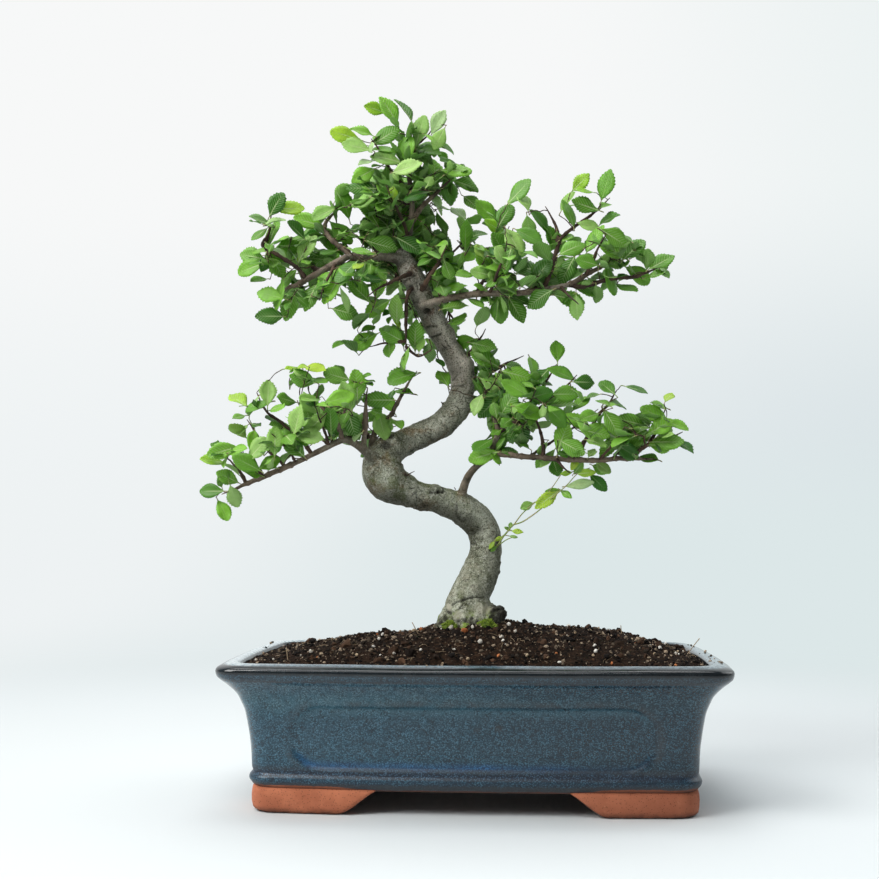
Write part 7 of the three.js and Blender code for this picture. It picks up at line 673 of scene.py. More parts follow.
    [(11.9, 15.3, 348.3, 0.41), (13.7, 11.9, 350.4, 0.41), (16.1, 8.6, 352.5, 0.41), (17.5, 6, 349, 0.32)],
    [(16.1, 8.6, 352.5, 0.35), (20.3, 8.3, 354.3, 0.32), (23.1, 8.9, 355.5, 0.32)],
    [(9.4, 7.6, 341.2, 0.32), (13.7, 7.1, 340.2, 0.32)],
    [(9.4, 7.6, 341.2, 0.32), (8.3, 10.6, 340.7, 0.32)],
    [(8, 2.7, 337.1, 0.32), (13.3, 1.5, 340.1, 0.32)],
    [(5.2, -7.3, 329.1, 0.93), (9.2, -7.7, 330, 0.93), (13.9, -8.5, 333, 0.91), (18.2, -8.9, 335.6, 0.91), (22.8, -11.9, 339.4, 0.65), (22.9, -12.9, 345.5, 0.62), (26.1, -16.6, 344.6, 0.51), (23.5, -17.5, 342.5, 0.34), (24.6, -19.1, 340.6, 0.32)],
    [(26.1, -16.6, 344.6, 0.35), (29.2, -21.2, 344.2, 0.32)],
    [(26.1, -16.6, 344.6, 0.35), (25.4, -19.1, 345.7, 0.32)],
    [(22.9, -12.9, 345.5, 0.38), (22.1, -17.7, 348.9, 0.34), (22.4, -19.9, 353.2, 0.32), (24.4, -23.3, 356.4, 0.32), (25.1, -25.1, 359.6, 0.32)],
    [(18.2, -8.9, 335.6, 0.35), (20.2, -7, 331.5, 0.32)],
    [(18.2, -8.9, 335.6, 0.71), (20.4, -7.8, 338.9, 0.65), (21.2, -5.9, 342.1, 0.65), (18.8, -6.6, 347.2, 0.62), (15.2, -7.7, 349.3, 0.62), (16.3, -7.4, 350.5, 0.46), (19.9, -8.1, 353.4, 0.41), (21.2, -4.9, 358.1, 0.34), (21.5, -1.8, 360.5, 0.34), (18.1, 1.4, 363.7, 0.32)],
    [(15.2, -7.7, 349.3, 0.35), (9.7, -7.8, 350.7, 0.32), (5.5, -8.1, 350.1, 0.32)],
    [(15.2, -7.7, 349.3, 0.38), (13.7, -8.8, 353.6, 0.34), (13, -10.7, 357.6, 0.34), (13.7, -11.2, 361.2, 0.34), (16, -11.9, 366.3, 0.32), (17.1, -12.2, 371.6, 0.32), (19, -12.4, 374, 0.32), (20.7, -12.7, 377.8, 0.32)],
    [(3.4, -14.2, 324, 0.46), (2.8, -17, 326.1, 0.46), (1.8, -20.7, 329.8, 0.46), (3.3, -20, 335.1, 0.41), (6.4, -21.2, 339.1, 0.34), (8.1, -22.7, 342.2, 0.34), (13.1, -23.2, 340.2, 0.32)],
    [(2.5, -17.8, 321.4, 0.32), (6.5, -18.6, 323.1, 0.32)],
    [(1.2, -23, 317.6, 0.32), (1.6, -24.1, 313.9, 0.32)],
    [(21.5, -51, 345.5, 0.32), (20.5, -48.1, 349.6, 0.32), (20.5, -45.1, 353, 0.32), (19.6, -41.1, 356.9, 0.32)],
    [(21, -50, 343.4, 0.41), (25.1, -45.3, 343.4, 0.41), (26.5, -41.4, 342.3, 0.34), (27.3, -37.9, 340.9, 0.32)],
    [(26.5, -41.4, 342.3, 0.34), (24.7, -36.7, 345.6, 0.32), (22.4, -34.2, 348.1, 0.32)],
    [(18.9, -45.8, 335.6, 0.32), (22.3, -45.1, 336, 0.32)],
    [(17, -42.2, 331.1, 0.32), (20.1, -46.3, 327.9, 0.32)],
    [(14.4, -36.2, 325.7, 0.34), (18.5, -37.5, 326.2, 0.34), (22.9, -39.2, 326.1, 0.34), (26.8, -40.3, 325.5, 0.32)],
    [(22.9, -39.2, 326.1, 0.34), (25.9, -42.4, 322.1, 0.32), (28.4, -44.9, 318.7, 0.32), (29.1, -47.6, 315, 0.32)],
    [(12.4, -31.2, 322, 0.41), (13.5, -29.9, 324.8, 0.41), (12.9, -26.2, 327.5, 0.32)],
    [(13.5, -29.9, 324.8, 0.35), (18, -27.3, 329.5, 0.32), (21.4, -26.2, 331.8, 0.32)],
    [(12.4, -31.2, 322, 0.34), (13.5, -31.7, 320.2, 0.34), (16.4, -34.1, 316.2, 0.32), (19.9, -36.9, 313.5, 0.32), (22.3, -39.5, 311, 0.32)],
    [(11.8, -29.4, 321, 0.32), (8.1, -29.1, 319.9, 0.32)],
    [(120.9, -10.7, 337.3, 0.32), (119.2, -6.1, 334.8, 0.32)],
    [(119.1, -11.3, 336.2, 0.32), (118.9, -17.4, 333.2, 0.32)],
    [(115.4, -12.5, 334.2, 0.32), (115.6, -12.6, 332.8, 0.32)],
    [(110.1, -14, 331.8, 0.32), (110.7, -13.6, 331.1, 0.32)],
    [(106.5, -15, 330.3, 0.32), (108.3, -12.5, 328.2, 0.32)],
    [(100.5, -16.6, 328.6, 0.32), (104.5, -19.3, 330.6, 0.32), (109.7, -22.3, 330.6, 0.32)],
    [(91.3, -19, 327.7, 0.32), (92.2, -16.8, 324.7, 0.32)],
    [(89.2, -19.4, 327.1, 0.32), (88.6, -15.6, 325.5, 0.32)],
    [(89.2, -19.4, 327.1, 0.32), (88.1, -18.8, 328.1, 0.32)],
    [(89.2, -19.4, 327.1, 0.32), (89.6, -20.8, 327.5, 0.32)],
    [(87.1, -19.8, 326.6, 0.32), (85.8, -18.4, 325.7, 0.32)],
    [(80.7, -21, 325.1, 0.32), (80, -23.4, 328.1, 0.32), (79.1, -26.5, 330, 0.32)],
    [(76.1, -22, 323.5, 0.32), (77.6, -26.6, 323, 0.32)],
    [(65.8, -24, 321.4, 0.34), (65.1, -26.3, 317.1, 0.34), (66.8, -26.2, 311.8, 0.32)],
    [(88.1, 1.5, 384.8, 0.32), (86.4, -1.6, 385.2, 0.32), (83, -5.8, 385.5, 0.32), (80.5, -9.7, 385.9, 0.32)],
    [(80.6, -1, 377.3, 0.46), (81.8, -3.7, 378.9, 0.46), (82.5, -7.8, 379.4, 0.46), (81.6, -10.7, 376.7, 0.41), (80.4, -12.3, 374.5, 0.41), (83.8, -14.7, 371.9, 0.32)],
    [(80.4, -12.3, 374.5, 0.35), (75.5, -9.8, 377.9, 0.32)],
    [(80.6, -1, 377.3, 0.32), (77.8, -2.3, 378.8, 0.32)],
    [(73.7, -3.3, 371.4, 0.41), (76.4, -3.2, 368.2, 0.41), (80.1, -2.1, 365.2, 0.41), (80.3, -3.4, 361.2, 0.34), (81.6, -7.8, 359.4, 0.32), (82.4, -11.5, 359.3, 0.32), (83.7, -16.5, 359.2, 0.32)],
    [(66, -7, 365, 0.32), (64.7, -9.1, 367.1, 0.32)],
    [(64.5, -7.8, 363.8, 0.34), (62.1, -7, 366.8, 0.34), (59.1, -5.8, 370.3, 0.32), (55.5, -3.6, 373.5, 0.32)],
    [(62.1, -7, 366.8, 0.34), (61.8, -7.4, 372, 0.32), (61, -7, 377.5, 0.32), (61.2, -8.3, 381.8, 0.32), (62.6, -8.6, 386.3, 0.32)],
    [(59.7, -10, 360, 0.32), (60.5, -5.2, 360.9, 0.32), (61.4, -1.1, 361.7, 0.32), (62.1, 4.6, 361, 0.32)],
    [(59.7, -10, 360, 0.32), (62.1, -11.9, 360.8, 0.32), (65, -15, 360.1, 0.32)],
    [(48.2, -6, 376, 0.34), (45.4, -9.4, 375.6, 0.34), (43, -12.6, 373.8, 0.34), (39.9, -17, 373.6, 0.34), (37.2, -20.2, 371.9, 0.34), (33.8, -24, 370.3, 0.32)],
    [(37.2, -20.2, 371.9, 0.34), (35.8, -18.7, 369.9, 0.32)],
    [(54, -10.3, 361, 0.32), (53.5, -15.9, 361.2, 0.32)],
    [(54.6, -12.3, 354.8, 0.32), (49.5, -10.2, 356, 0.32)],
    [(54.2, -13.8, 350.5, 0.34), (56.2, -16.1, 351.2, 0.34), (55.2, -18.6, 352.9, 0.32)],
    [(50.1, -19.2, 335.9, 0.32), (50.3, -19.1, 336.9, 0.32)],
    [(49.5, -20, 333.9, 0.32), (52.3, -21.7, 334.5, 0.32)],
    [(48.9, -20.8, 332.1, 0.32), (50.2, -17.7, 331.6, 0.32), (52.8, -14.8, 329.8, 0.32)],
    [(48.9, -20.8, 332.1, 0.34), (46.4, -19, 331.5, 0.34), (43.9, -20.7, 332.4, 0.32)],
    [(48.9, -20.8, 332.1, 0.34), (49.7, -22.9, 331.7, 0.34), (50.8, -27.2, 333.4, 0.32), (52.9, -30.7, 335.9, 0.32), (52.6, -33.2, 338.7, 0.32)],
    [(47.2, -23.2, 326.6, 0.34), (41.9, -23.2, 328.6, 0.34), (38.2, -23.5, 328, 0.32), (34.5, -22.1, 328, 0.32)],
    [(97.7, -14, 343.1, 0.41), (98.6, -19.2, 345.1, 0.41), (103.4, -22.1, 344.6, 0.34), (102.5, -22.7, 348.7, 0.32)],
    [(97.7, -14, 343.1, 0.32), (101.2, -12.2, 341.5, 0.32)],
    [(95.6, -14.7, 342.1, 0.32), (97.2, -17.9, 340.3, 0.32), (99.5, -20.6, 338.3, 0.32)],
    [(95.6, -14.7, 342.1, 0.32), (95.2, -10.7, 342.4, 0.32), (94.8, -7.6, 343, 0.32)],
    [(95.6, -14.7, 342.1, 0.32), (96.2, -13.5, 340.2, 0.32)],
    [(93.5, -15.3, 341.1, 0.32), (95.1, -15.3, 336.8, 0.32)],
    [(89.6, -16.7, 339.1, 0.32), (91.7, -21.5, 342.3, 0.32)],
    [(85.8, -18, 337.1, 0.41), (87.6, -22.1, 339, 0.41), (90.7, -23.3, 338.4, 0.32), (93.8, -23.5, 336.4, 0.32)],
    [(87.6, -22.1, 339, 0.35), (85.6, -25.7, 344.2, 0.32)],
    [(85.8, -18, 337.1, 0.32), (84.4, -14.1, 335.7, 0.32)],
    [(84.1, -18.5, 336.2, 0.32), (82.3, -20, 339.3, 0.32), (79.7, -21.2, 342.9, 0.32)],
    [(84.1, -18.5, 336.2, 0.34), (84.4, -18.5, 337.5, 0.34), (84.1, -17.1, 338.6, 0.32)],
    [(77.1, -20.5, 332.4, 0.46), (74, -17.9, 335.7, 0.46), (72.2, -17.4, 339.5, 0.41), (71.4, -16.9, 342.7, 0.41), (65.9, -17.1, 344, 0.34), (64.4, -17.9, 342.3, 0.32)],
    [(67.8, -23, 326.5, 0.32), (68.4, -26.6, 327.9, 0.32)],
    [(57.9, -24.7, 322, 0.32), (59.5, -22.2, 321.5, 0.32)],
    [(47.7, -26, 319.6, 0.41), (49.1, -23.1, 316.3, 0.41), (46.1, -20.3, 315.8, 0.34), (45.7, -19.5, 313.8, 0.32)],
    [(22.9, -25.5, 317.1, 0.32), (24.1, -22.8, 318.7, 0.32)],
    [(16.4, -24.8, 317.4, 0.32), (16.1, -23.2, 320.3, 0.32)],
    [(16.4, -24.8, 317.4, 0.32), (17.6, -25.1, 318.1, 0.32)],
    [(14.3, -24.5, 317.5, 0.55), (14.2, -21.7, 319.1, 0.55), (14.9, -20.8, 316.3, 0.46), (16.7, -18.9, 316.6, 0.41), (14.6, -14.6, 316.4, 0.34), (11, -10.5, 315.3, 0.32), (8.6, -7.7, 315.1, 0.32)],
    [(14.2, -21.7, 319.1, 0.35), (13.3, -17.9, 322.3, 0.32), (12.8, -14.8, 324.8, 0.32)],
    [(10, -24, 317.7, 0.34), (8.7, -21.8, 319.9, 0.34), (9.9, -19.2, 318.8, 0.32)],
    [(5.6, -23.5, 317.7, 0.32), (7, -22, 317, 0.32)],
    [(-7.2, -22, 316.7, 0.32), (-6.1, -18.2, 315.9, 0.32)],
    [(-9.3, -21.5, 316.5, 0.32), (-9.2, -18.9, 321.4, 0.32)],
    [(-17.7, -19.2, 315.6, 0.34), (-17.3, -16.7, 312.7, 0.34), (-16.8, -13.8, 308.9, 0.34), (-16.2, -11.2, 304, 0.34), (-18.1, -7.6, 301.9, 0.32), (-19.5, -3.9, 301.1, 0.32)],
    [(-19.7, -18.5, 315.2, 0.34), (-21.2, -22.4, 312.2, 0.34), (-22.2, -24.4, 309.2, 0.32), (-22.9, -25.9, 306.5, 0.32)],
    [(-19.7, -18.5, 315.2, 0.32), (-18.1, -17.1, 314.8, 0.32)],
    [(-21.7, -17.8, 314.9, 0.34), (-22.4, -20.6, 316.6, 0.34), (-22.9, -25.2, 317.8, 0.32)],
    [(-22.4, -20.6, 316.6, 0.34), (-21.3, -23.1, 320.2, 0.32), (-21.9, -24.9, 322.7, 0.32)],
    [(-21.7, -17.8, 314.9, 0.55), (-19.3, -12.2, 315.8, 0.55), (-18, -11.2, 318.8, 0.51), (-19.4, -8.1, 321.6, 0.46), (-18.2, -5, 324.6, 0.41), (-17, -1.8, 328, 0.41), (-14.3, -0.2, 333.6, 0.34), (-12.6, 0.2, 337.4, 0.34), (-11.9, -3.4, 336.6, 0.32)],
    [(-19.4, -8.1, 321.6, 0.35), (-21, -6.3, 323.6, 0.32)],
    [(-18, -11.2, 318.8, 0.35), (-16.5, -10.6, 321.8, 0.32)],
    [(-27.5, -18, 283, 0.32), (-28.3, -19.9, 286.5, 0.32), (-29.2, -21.5, 289.1, 0.32)],
    [(-29.5, -17.8, 281.9, 0.32), (-28.2, -16.5, 282, 0.32)],
    [(-35.3, -17, 278.7, 0.32), (-36.1, -21.1, 278.5, 0.32)],
    [(-38, -16.5, 279.8, 0.34), (-38.2, -11.9, 280.7, 0.34), (-39.4, -6.9, 280.7, 0.32)],
    [(-38.2, -11.9, 280.7, 0.34), (-34, -7.5, 281, 0.32), (-31.1, -4.7, 280.1, 0.32), (-27.1, -2.5, 279.9, 0.32)],
    [(-43.5, -15.3, 284, 0.32), (-41.6, -18.9, 286, 0.32)],
    [(-68.4, -13, 285.9, 0.34), (-70.2, -16, 289, 0.34), (-72.1, -19.5, 290.6, 0.34), (-74.5, -22, 292.9, 0.34), (-75, -26.9, 294.4, 0.32)],
    [(-68.4, -13, 285.9, 0.32), (-74.3, -13.2, 287.2, 0.32), (-79.1, -14.2, 289.1, 0.32)],
    [(-68.4, -13, 285.9, 0.32), (-72.2, -13.9, 283.7, 0.32), (-75.6, -15, 279.8, 0.32)],
    [(-68.4, -13, 285.9, 0.32), (-67.8, -12.7, 289.5, 0.32), (-67.2, -12.7, 294.3, 0.32), (-67, -12.5, 298.5, 0.32)],
    [(-59.2, -14, 287.9, 0.32), (-60, -13.9, 292.2, 0.32), (-61.1, -14.2, 295, 0.32)],
    [(-57.2, -14.2, 288, 0.32), (-56.1, -9.8, 291.9, 0.32)],
    [(-44.9, -15, 282.4, 0.32), (-44.8, -18.7, 280.2, 0.32), (-46, -22.8, 277.3, 0.32)],
    [(-44.9, -15, 282.4, 0.32), (-45.6, -11.3, 282.9, 0.32), (-46.4, -7.9, 283.5, 0.32)],
    [(-44.8, -15, 286.6, 0.32), (-44.1, -13.2, 286.8, 0.32)],
    [(-44.7, -15, 295.2, 0.32), (-47.8, -12.9, 296.1, 0.32), (-50.9, -10.4, 296.7, 0.32)],
    [(-44.4, -14, 316.8, 0.32), (-48.4, -13.5, 317.6, 0.32), (-53.1, -11.5, 317.8, 0.32)],
    [(-43.9, -13.3, 318.7, 0.46), (-42.8, -10.1, 317.3, 0.46), (-42.5, -6.3, 315.6, 0.46), (-41.8, -2.3, 313.4, 0.46), (-46.4, 0.4, 311.6, 0.34), (-52.1, 0.8, 311.6, 0.34), (-54.8, 2.5, 311.2, 0.32)],
    [(-41.8, -2.3, 313.4, 0.35), (-40.2, 1, 310.2, 0.32), (-38.3, 3.6, 307.3, 0.32), (-36.8, 6.8, 305, 0.32), (-35, 8.5, 302.4, 0.32)],
    [(-42.7, -12, 322.5, 0.32), (-46.3, -10.2, 323.9, 0.32)],
    [(-60.8, -42.2, 317.3, 0.34), (-61.9, -40.2, 314.4, 0.34), (-62.1, -38.2, 312.2, 0.34), (-63, -36.2, 308.9, 0.34), (-65.1, -33.3, 304.8, 0.34), (-65.6, -27.8, 306.5, 0.32), (-65.2, -23.9, 310.6, 0.32)],
    [(-56.7, -37.8, 320.8, 0.32), (-54.1, -41.2, 322.5, 0.32)],
    [(-49.6, -28.5, 326.6, 0.32), (-53.9, -29.7, 330.2, 0.32)],
    [(-45.8, -22.2, 330, 0.32), (-48.4, -19.3, 328.1, 0.32)],
    [(-21.4, -35.4, 337, 0.32), (-24.7, -37.9, 338.4, 0.32), (-28.7, -39.3, 340.2, 0.32), (-32.3, -42.7, 341.4, 0.32)],
    [(-21.4, -35.4, 337, 0.32), (-19.8, -32.6, 339.7, 0.32)],
    [(-22.4, -33.8, 335.8, 0.41), (-24.3, -32, 339.9, 0.41), (-26.7, -30.4, 344.2, 0.41), (-26.5, -26.7, 347.2, 0.34), (-25.6, -23.6, 349, 0.32)],
    [(-26.5, -26.7, 347.2, 0.34), (-29.8, -25, 349.6, 0.32), (-33.1, -23, 351.7, 0.32)],
    [(-29.6, -21.8, 328.3, 0.32), (-26.6, -18.4, 328.2, 0.32), (-24.4, -14.4, 327.6, 0.32)],
    [(-111.9, 60, 256.7, 0.32), (-116.9, 58.6, 255.9, 0.32)],
    [(-110.2, 58.9, 255.8, 0.32), (-108.3, 61.8, 258.4, 0.32), (-107.1, 65.2, 261.2, 0.32)],
    [(-107, 56.6, 253.8, 0.32), (-110.2, 59.8, 252.1, 0.32), (-112.1, 62.6, 250.1, 0.32), (-115.6, 65.9, 246.3, 0.32)],
    [(-107, 56.6, 253.8, 0.32), (-110, 55.6, 249.9, 0.32)],
    [(-103.7, 54.3, 251.9, 0.32), (-104.7, 57.2, 249.5, 0.32), (-105, 60.7, 245.3, 0.32)],
    [(-103.7, 54.3, 251.9, 0.65), (-106.7, 49.3, 253.1, 0.65), (-109.8, 45.5, 251.9, 0.65), (-108.8, 42.2, 254.7, 0.62), (-107.5, 37.1, 255.1, 0.58), (-104.2, 36.5, 253.5, 0.55), (-100.2, 34.8, 251.2, 0.55), (-103, 30.4, 250.3, 0.46), (-106.9, 29.3, 245.4, 0.41), (-108.4, 32.5, 244.5, 0.34), (-109.4, 36.8, 244.6, 0.34), (-107.5, 39.4, 243.2, 0.32), (-104.2, 40.6, 240.3, 0.32)],
    [(-100.2, 34.8, 251.2, 0.35), (-96.9, 33.4, 248, 0.32), (-93.3, 32.2, 245.4, 0.32)],
    [(-100.5, 52, 250, 0.32), (-97.5, 53.4, 253.3, 0.32), (-95.4, 55.9, 256.8, 0.32)],
    [(-100.5, 52, 250, 0.34), (-98.1, 54.7, 249.3, 0.34), (-96.1, 57.7, 248.1, 0.34), (-96.2, 61.9, 244.1, 0.32), (-96.5, 65.7, 240.7, 0.32)],
    [(-99.2, 50.7, 249.1, 0.32), (-98.9, 51.9, 247.5, 0.32)],
    [(-97.9, 49.3, 248.2, 0.46), (-100.6, 44.8, 251.7, 0.46), (-104.5, 44.9, 250.5, 0.34), (-108.1, 46.5, 248.3, 0.32), (-110.7, 49.8, 246.7, 0.32)],
    [(-100.6, 44.8, 251.7, 0.35), (-99.8, 43.9, 256.3, 0.32), (-97.4, 43.8, 260.3, 0.32)],
    [(-92.7, 44, 244.5, 0.46), (-93, 47, 242.2, 0.46), (-93.2, 50.3, 238.8, 0.46), (-92.9, 51.4, 237.4, 0.41), (-92.7, 48.8, 233.7, 0.34), (-96.3, 47.4, 235.5, 0.32)],
    [(-91.4, 42.7, 243.5, 0.58), (-90.6, 41.3, 247.8, 0.58), (-90, 40, 251.5, 0.58), (-88.2, 38.9, 255.4, 0.55), (-87.1, 38.2, 259.4, 0.55), (-88.2, 39.8, 262.8, 0.51), (-89.3, 42.4, 264.7, 0.51), (-85.2, 46.1, 264.3, 0.41), (-80.9, 47.6, 262.9, 0.41), (-78.7, 49, 259.8, 0.32), (-77.8, 51, 257.8, 0.32)],
    [(-80.9, 47.6, 262.9, 0.35), (-77.2, 45.3, 261.3, 0.32), (-74.7, 43, 260.6, 0.32)],
    [(-89.3, 42.4, 264.7, 0.35), (-92.3, 44.1, 270.1, 0.32)],
    [(-90.1, 41.3, 242.6, 0.41), (-87.4, 43.7, 243.2, 0.41), (-83.9, 45.4, 244.9, 0.34), (-81, 46.2, 246.3, 0.34), (-78.9, 49.4, 244.3, 0.32)],
    [(-85.3, 35.8, 238.8, 0.34), (-83.5, 39.6, 234.7, 0.34), (-86.1, 43.8, 232.3, 0.32)],
    [(-84.1, 34.4, 237.8, 0.32), (-80.3, 38.4, 240, 0.32)],
    [(-83, 33, 236.8, 0.34), (-88.9, 30.1, 237.5, 0.34), (-93, 26.7, 235.7, 0.32)],
    [(-79.5, 28.8, 233.9, 0.34), (-80.4, 29.2, 239.4, 0.34), (-82.9, 28.6, 244.6, 0.34), (-86.4, 27.7, 248.6, 0.32), (-88.9, 26.2, 250.7, 0.32), (-92, 25.6, 252.5, 0.32)],
    [(-78.3, 27.4, 233, 0.46), (-80.8, 27.4, 230.8, 0.46), (-86.7, 26.2, 231.6, 0.41), (-91.5, 26.4, 229.3, 0.34), (-96.5, 27.4, 226.9, 0.34), (-99.6, 23.8, 226.7, 0.32), (-101.5, 19.4, 227.2, 0.32)],
    [(-80.8, 27.4, 230.8, 0.35), (-82.9, 27.3, 227.9, 0.32)],
    [(-77.1, 26, 232, 0.32), (-76.1, 28.1, 230, 0.32)],
    [(-72.1, 18, 226.6, 0.32), (-68.8, 18.8, 227.6, 0.32), (-65.5, 20.8, 228.1, 0.32)],
    [(-71, 16.4, 225.5, 0.65), (-71.1, 12.1, 226.8, 0.65), (-70.4, 8.3, 227.8, 0.65), (-70.2, 3.4, 229.2, 0.65), (-74, 5.4, 231.7, 0.58), (-77.4, 6.7, 229.8, 0.41), (-79.9, 8.8, 226.2, 0.34), (-81.1, 11.6, 224, 0.32), (-81.8, 14.6, 223.2, 0.32)],
    [(-77.4, 6.7, 229.8, 0.35), (-83.9, 9.4, 229.4, 0.32), (-87.2, 11.6, 230.1, 0.32)],
    [(-74, 5.4, 231.7, 0.45), (-75.4, 5.4, 236.6, 0.41), (-76.6, 10.2, 239.1, 0.34), (-77, 14.9, 239.7, 0.34), (-74.4, 17.4, 242.1, 0.32), (-72.1, 19.3, 245.5, 0.32), (-69.3, 20.7, 247.6, 0.32)],
    [(-75.4, 5.4, 236.6, 0.35), (-75, 4.5, 241.6, 0.32)],
    [(-70.2, 3.4, 229.2, 0.35), (-70.7, 0.3, 226.8, 0.32)],
    [(-70, 14.8, 224.4, 0.34), (-68.6, 16.8, 222.2, 0.34), (-68, 19.4, 219.5, 0.34), (-64.7, 18.7, 219, 0.32)],
    [(-69, 13.2, 223.3, 0.55), (-67.6, 13.1, 226.5, 0.55), (-65, 12.6, 229.9, 0.55), (-62.5, 13.7, 228.9, 0.41), (-59.8, 16.7, 225.3, 0.34), (-56.5, 18.7, 220.9, 0.32)],
    [(-62.5, 13.7, 228.9, 0.35), (-58.2, 12.5, 225.1, 0.32), (-55.4, 12.5, 222.2, 0.32), (-52.8, 10.9, 219.5, 0.32)],
    [(-65, 12.6, 229.9, 0.38), (-62.8, 14.2, 232.6, 0.34), (-60.2, 16.8, 236.4, 0.32), (-57.8, 17.8, 238, 0.32)],
    [(-62.8, 14.2, 232.6, 0.34), (-59, 14, 234.7, 0.32), (-54.2, 13, 236, 0.32), (-51, 12, 236.5, 0.32)],
    [(-69, 13.2, 223.3, 0.32), (-71.1, 13.2, 223, 0.32)],
    [(-67, 10, 221.2, 0.32), (-66.9, 8.7, 223.8, 0.32)],
    [(18, 65.1, 284.3, 0.65), (19.1, 67.2, 280.7, 0.65), (19.9, 68, 275.3, 0.51), (21.1, 68.9, 271, 0.41), (23.4, 66.8, 268.2, 0.34), (26.5, 63.1, 266, 0.34), (31.4, 59.6, 265.7, 0.32), (36, 59.4, 265.5, 0.32)],
    [(19.9, 68, 275.3, 0.38), (16.7, 70.2, 271.3, 0.34), (13.4, 73.3, 267.4, 0.32), (10.8, 75.5, 264.5, 0.32)],
    [(19.1, 67.2, 280.7, 0.45), (23.4, 65.9, 280.2, 0.41), (27.9, 66, 279.8, 0.34), (32.7, 67.3, 280.4, 0.34), (36.7, 70.2, 279.5, 0.32), (37.6, 72.6, 277.7, 0.32), (39.5, 75.6, 275.7, 0.32)],
    [(12.4, 60, 280.7, 0.34), (11.3, 58.5, 284.6, 0.34), (7, 57.6, 288.3, 0.32)],
    [(8.8, 55.5, 278.3, 0.34), (6, 58.9, 277.3, 0.34), (5.1, 64.1, 276.6, 0.32), (5, 69, 275.6, 0.32), (5.8, 73.1, 274.6, 0.32)],
    [(7.6, 54, 277.5, 0.32), (8.3, 56.6, 274, 0.32), (9.3, 60, 269.9, 0.32)],
    [(6.4, 52.5, 276.6, 0.41), (5.8, 51.3, 281.4, 0.41), (5.5, 49.2, 286.3, 0.41), (8.4, 49.9, 290.7, 0.32), (11.3, 51.4, 292.8, 0.32)],
    [(5.5, 49.2, 286.3, 0.35), (3.6, 49.9, 290.6, 0.32), (1.2, 50.5, 295, 0.32), (-0.5, 51.9, 296.9, 0.32), (-2.9, 54.4, 300.3, 0.32)],
    [(5.2, 51, 275.8, 0.32), (7.6, 47.8, 278.2, 0.32), (10.3, 44.8, 281.6, 0.32), (13.1, 41.4, 284.3, 0.32)],
    [(5.2, 51, 275.8, 0.34), (4.2, 54.2, 273.8, 0.34), (0.2, 57.8, 272.9, 0.32), (-2.7, 60.3, 273.2, 0.32)],
    [(4, 49.5, 275, 0.32), (0.8, 51.7, 275.2, 0.32), (-2.8, 54.4, 273.5, 0.32)],
    [(1.8, 46.2, 273.3, 0.32), (-0.8, 47.9, 273.4, 0.32)],
    [(0.8, 44.5, 272.3, 0.32), (-1.4, 46.9, 271.4, 0.32), (-3.8, 50.2, 269.5, 0.32), (-6.1, 53.1, 268.2, 0.32)],
    [(-0.1, 42.8, 271.4, 0.51), (0.5, 42.2, 267.6, 0.51), (1, 41.4, 263.5, 0.51), (2.2, 40.8, 259.1, 0.51), (3.5, 44.4, 258.1, 0.41), (5.3, 47.9, 257.3, 0.41), (8.6, 48.8, 255.1, 0.34), (11.8, 49.6, 254, 0.34), (15.4, 48.9, 252.1, 0.32)],
    [(11.8, 49.6, 254, 0.34), (15.6, 52.7, 252.4, 0.32), (17.1, 56.1, 251, 0.32)],
    [(5.3, 47.9, 257.3, 0.35), (7, 51.9, 257.2, 0.32)],
    [(2.2, 40.8, 259.1, 0.35), (7.8, 38, 257.1, 0.32)],
    [(2.2, 40.8, 259.1, 0.35), (3.2, 40.1, 253.4, 0.32)],
    [(-0.1, 42.8, 271.4, 0.46), (1.5, 39.6, 273.2, 0.46), (3, 37, 274.2, 0.46), (2.4, 34.7, 277.5, 0.41), (0, 38.9, 280.1, 0.32)],
    [(2.4, 34.7, 277.5, 0.35), (-0.6, 30.3, 280.4, 0.32), (-2.2, 28.1, 283.2, 0.32)],
    [(-2.1, 39.2, 269.6, 0.32), (-1.1, 40.4, 266.5, 0.32), (0.4, 43.3, 263.2, 0.32)],
    [(-2.1, 39.2, 269.6, 0.32), (-6.1, 40.4, 269.6, 0.32), (-10.5, 40.2, 269.3, 0.32)],
    [(-2.1, 39.2, 269.6, 0.32), (-3.7, 40.4, 271.5, 0.32)],
    [(-3.1, 37.5, 268.6, 0.65), (2.3, 36.5, 268.4, 0.65), (8.4, 37.9, 268.1, 0.62), (13.4, 35.8, 270.5, 0.55), (15.9, 32.8, 272.1, 0.55), (18.4, 34.9, 272.1, 0.51), (20, 38.7, 270.9, 0.46), (20.7, 42, 269.3, 0.46), (24.7, 44.1, 269, 0.34), (29, 45.8, 270, 0.34), (28.7, 48, 274.3, 0.32), (29.2, 48.9, 277.3, 0.32), (26.5, 50.2, 281.5, 0.32)],
    [(20.7, 42, 269.3, 0.35), (19, 48.3, 268.6, 0.32)],
    [(8.4, 37.9, 268.1, 0.38), (11.6, 39.6, 268.3, 0.34), (12.8, 43.8, 270.7, 0.32), (14.9, 47.8, 273.1, 0.32)],
    [(-5.7, 32.2, 265.9, 0.32), (-10.4, 35.5, 266.1, 0.32)],
    [(-7.1, 28.8, 264.1, 0.65), (-8.9, 28.2, 266, 0.65), (-11, 26.6, 269.4, 0.65), (-7.7, 25.7, 274.8, 0.46), (-2.7, 24.8, 274.1, 0.41), (-2.4, 25.8, 269.8, 0.32)],
    [(-2.7, 24.8, 274.1, 0.35), (0.6, 27.8, 272.4, 0.32)],
    [(-11, 26.6, 269.4, 0.35), (-16.4, 28.9, 268.8, 0.32)],
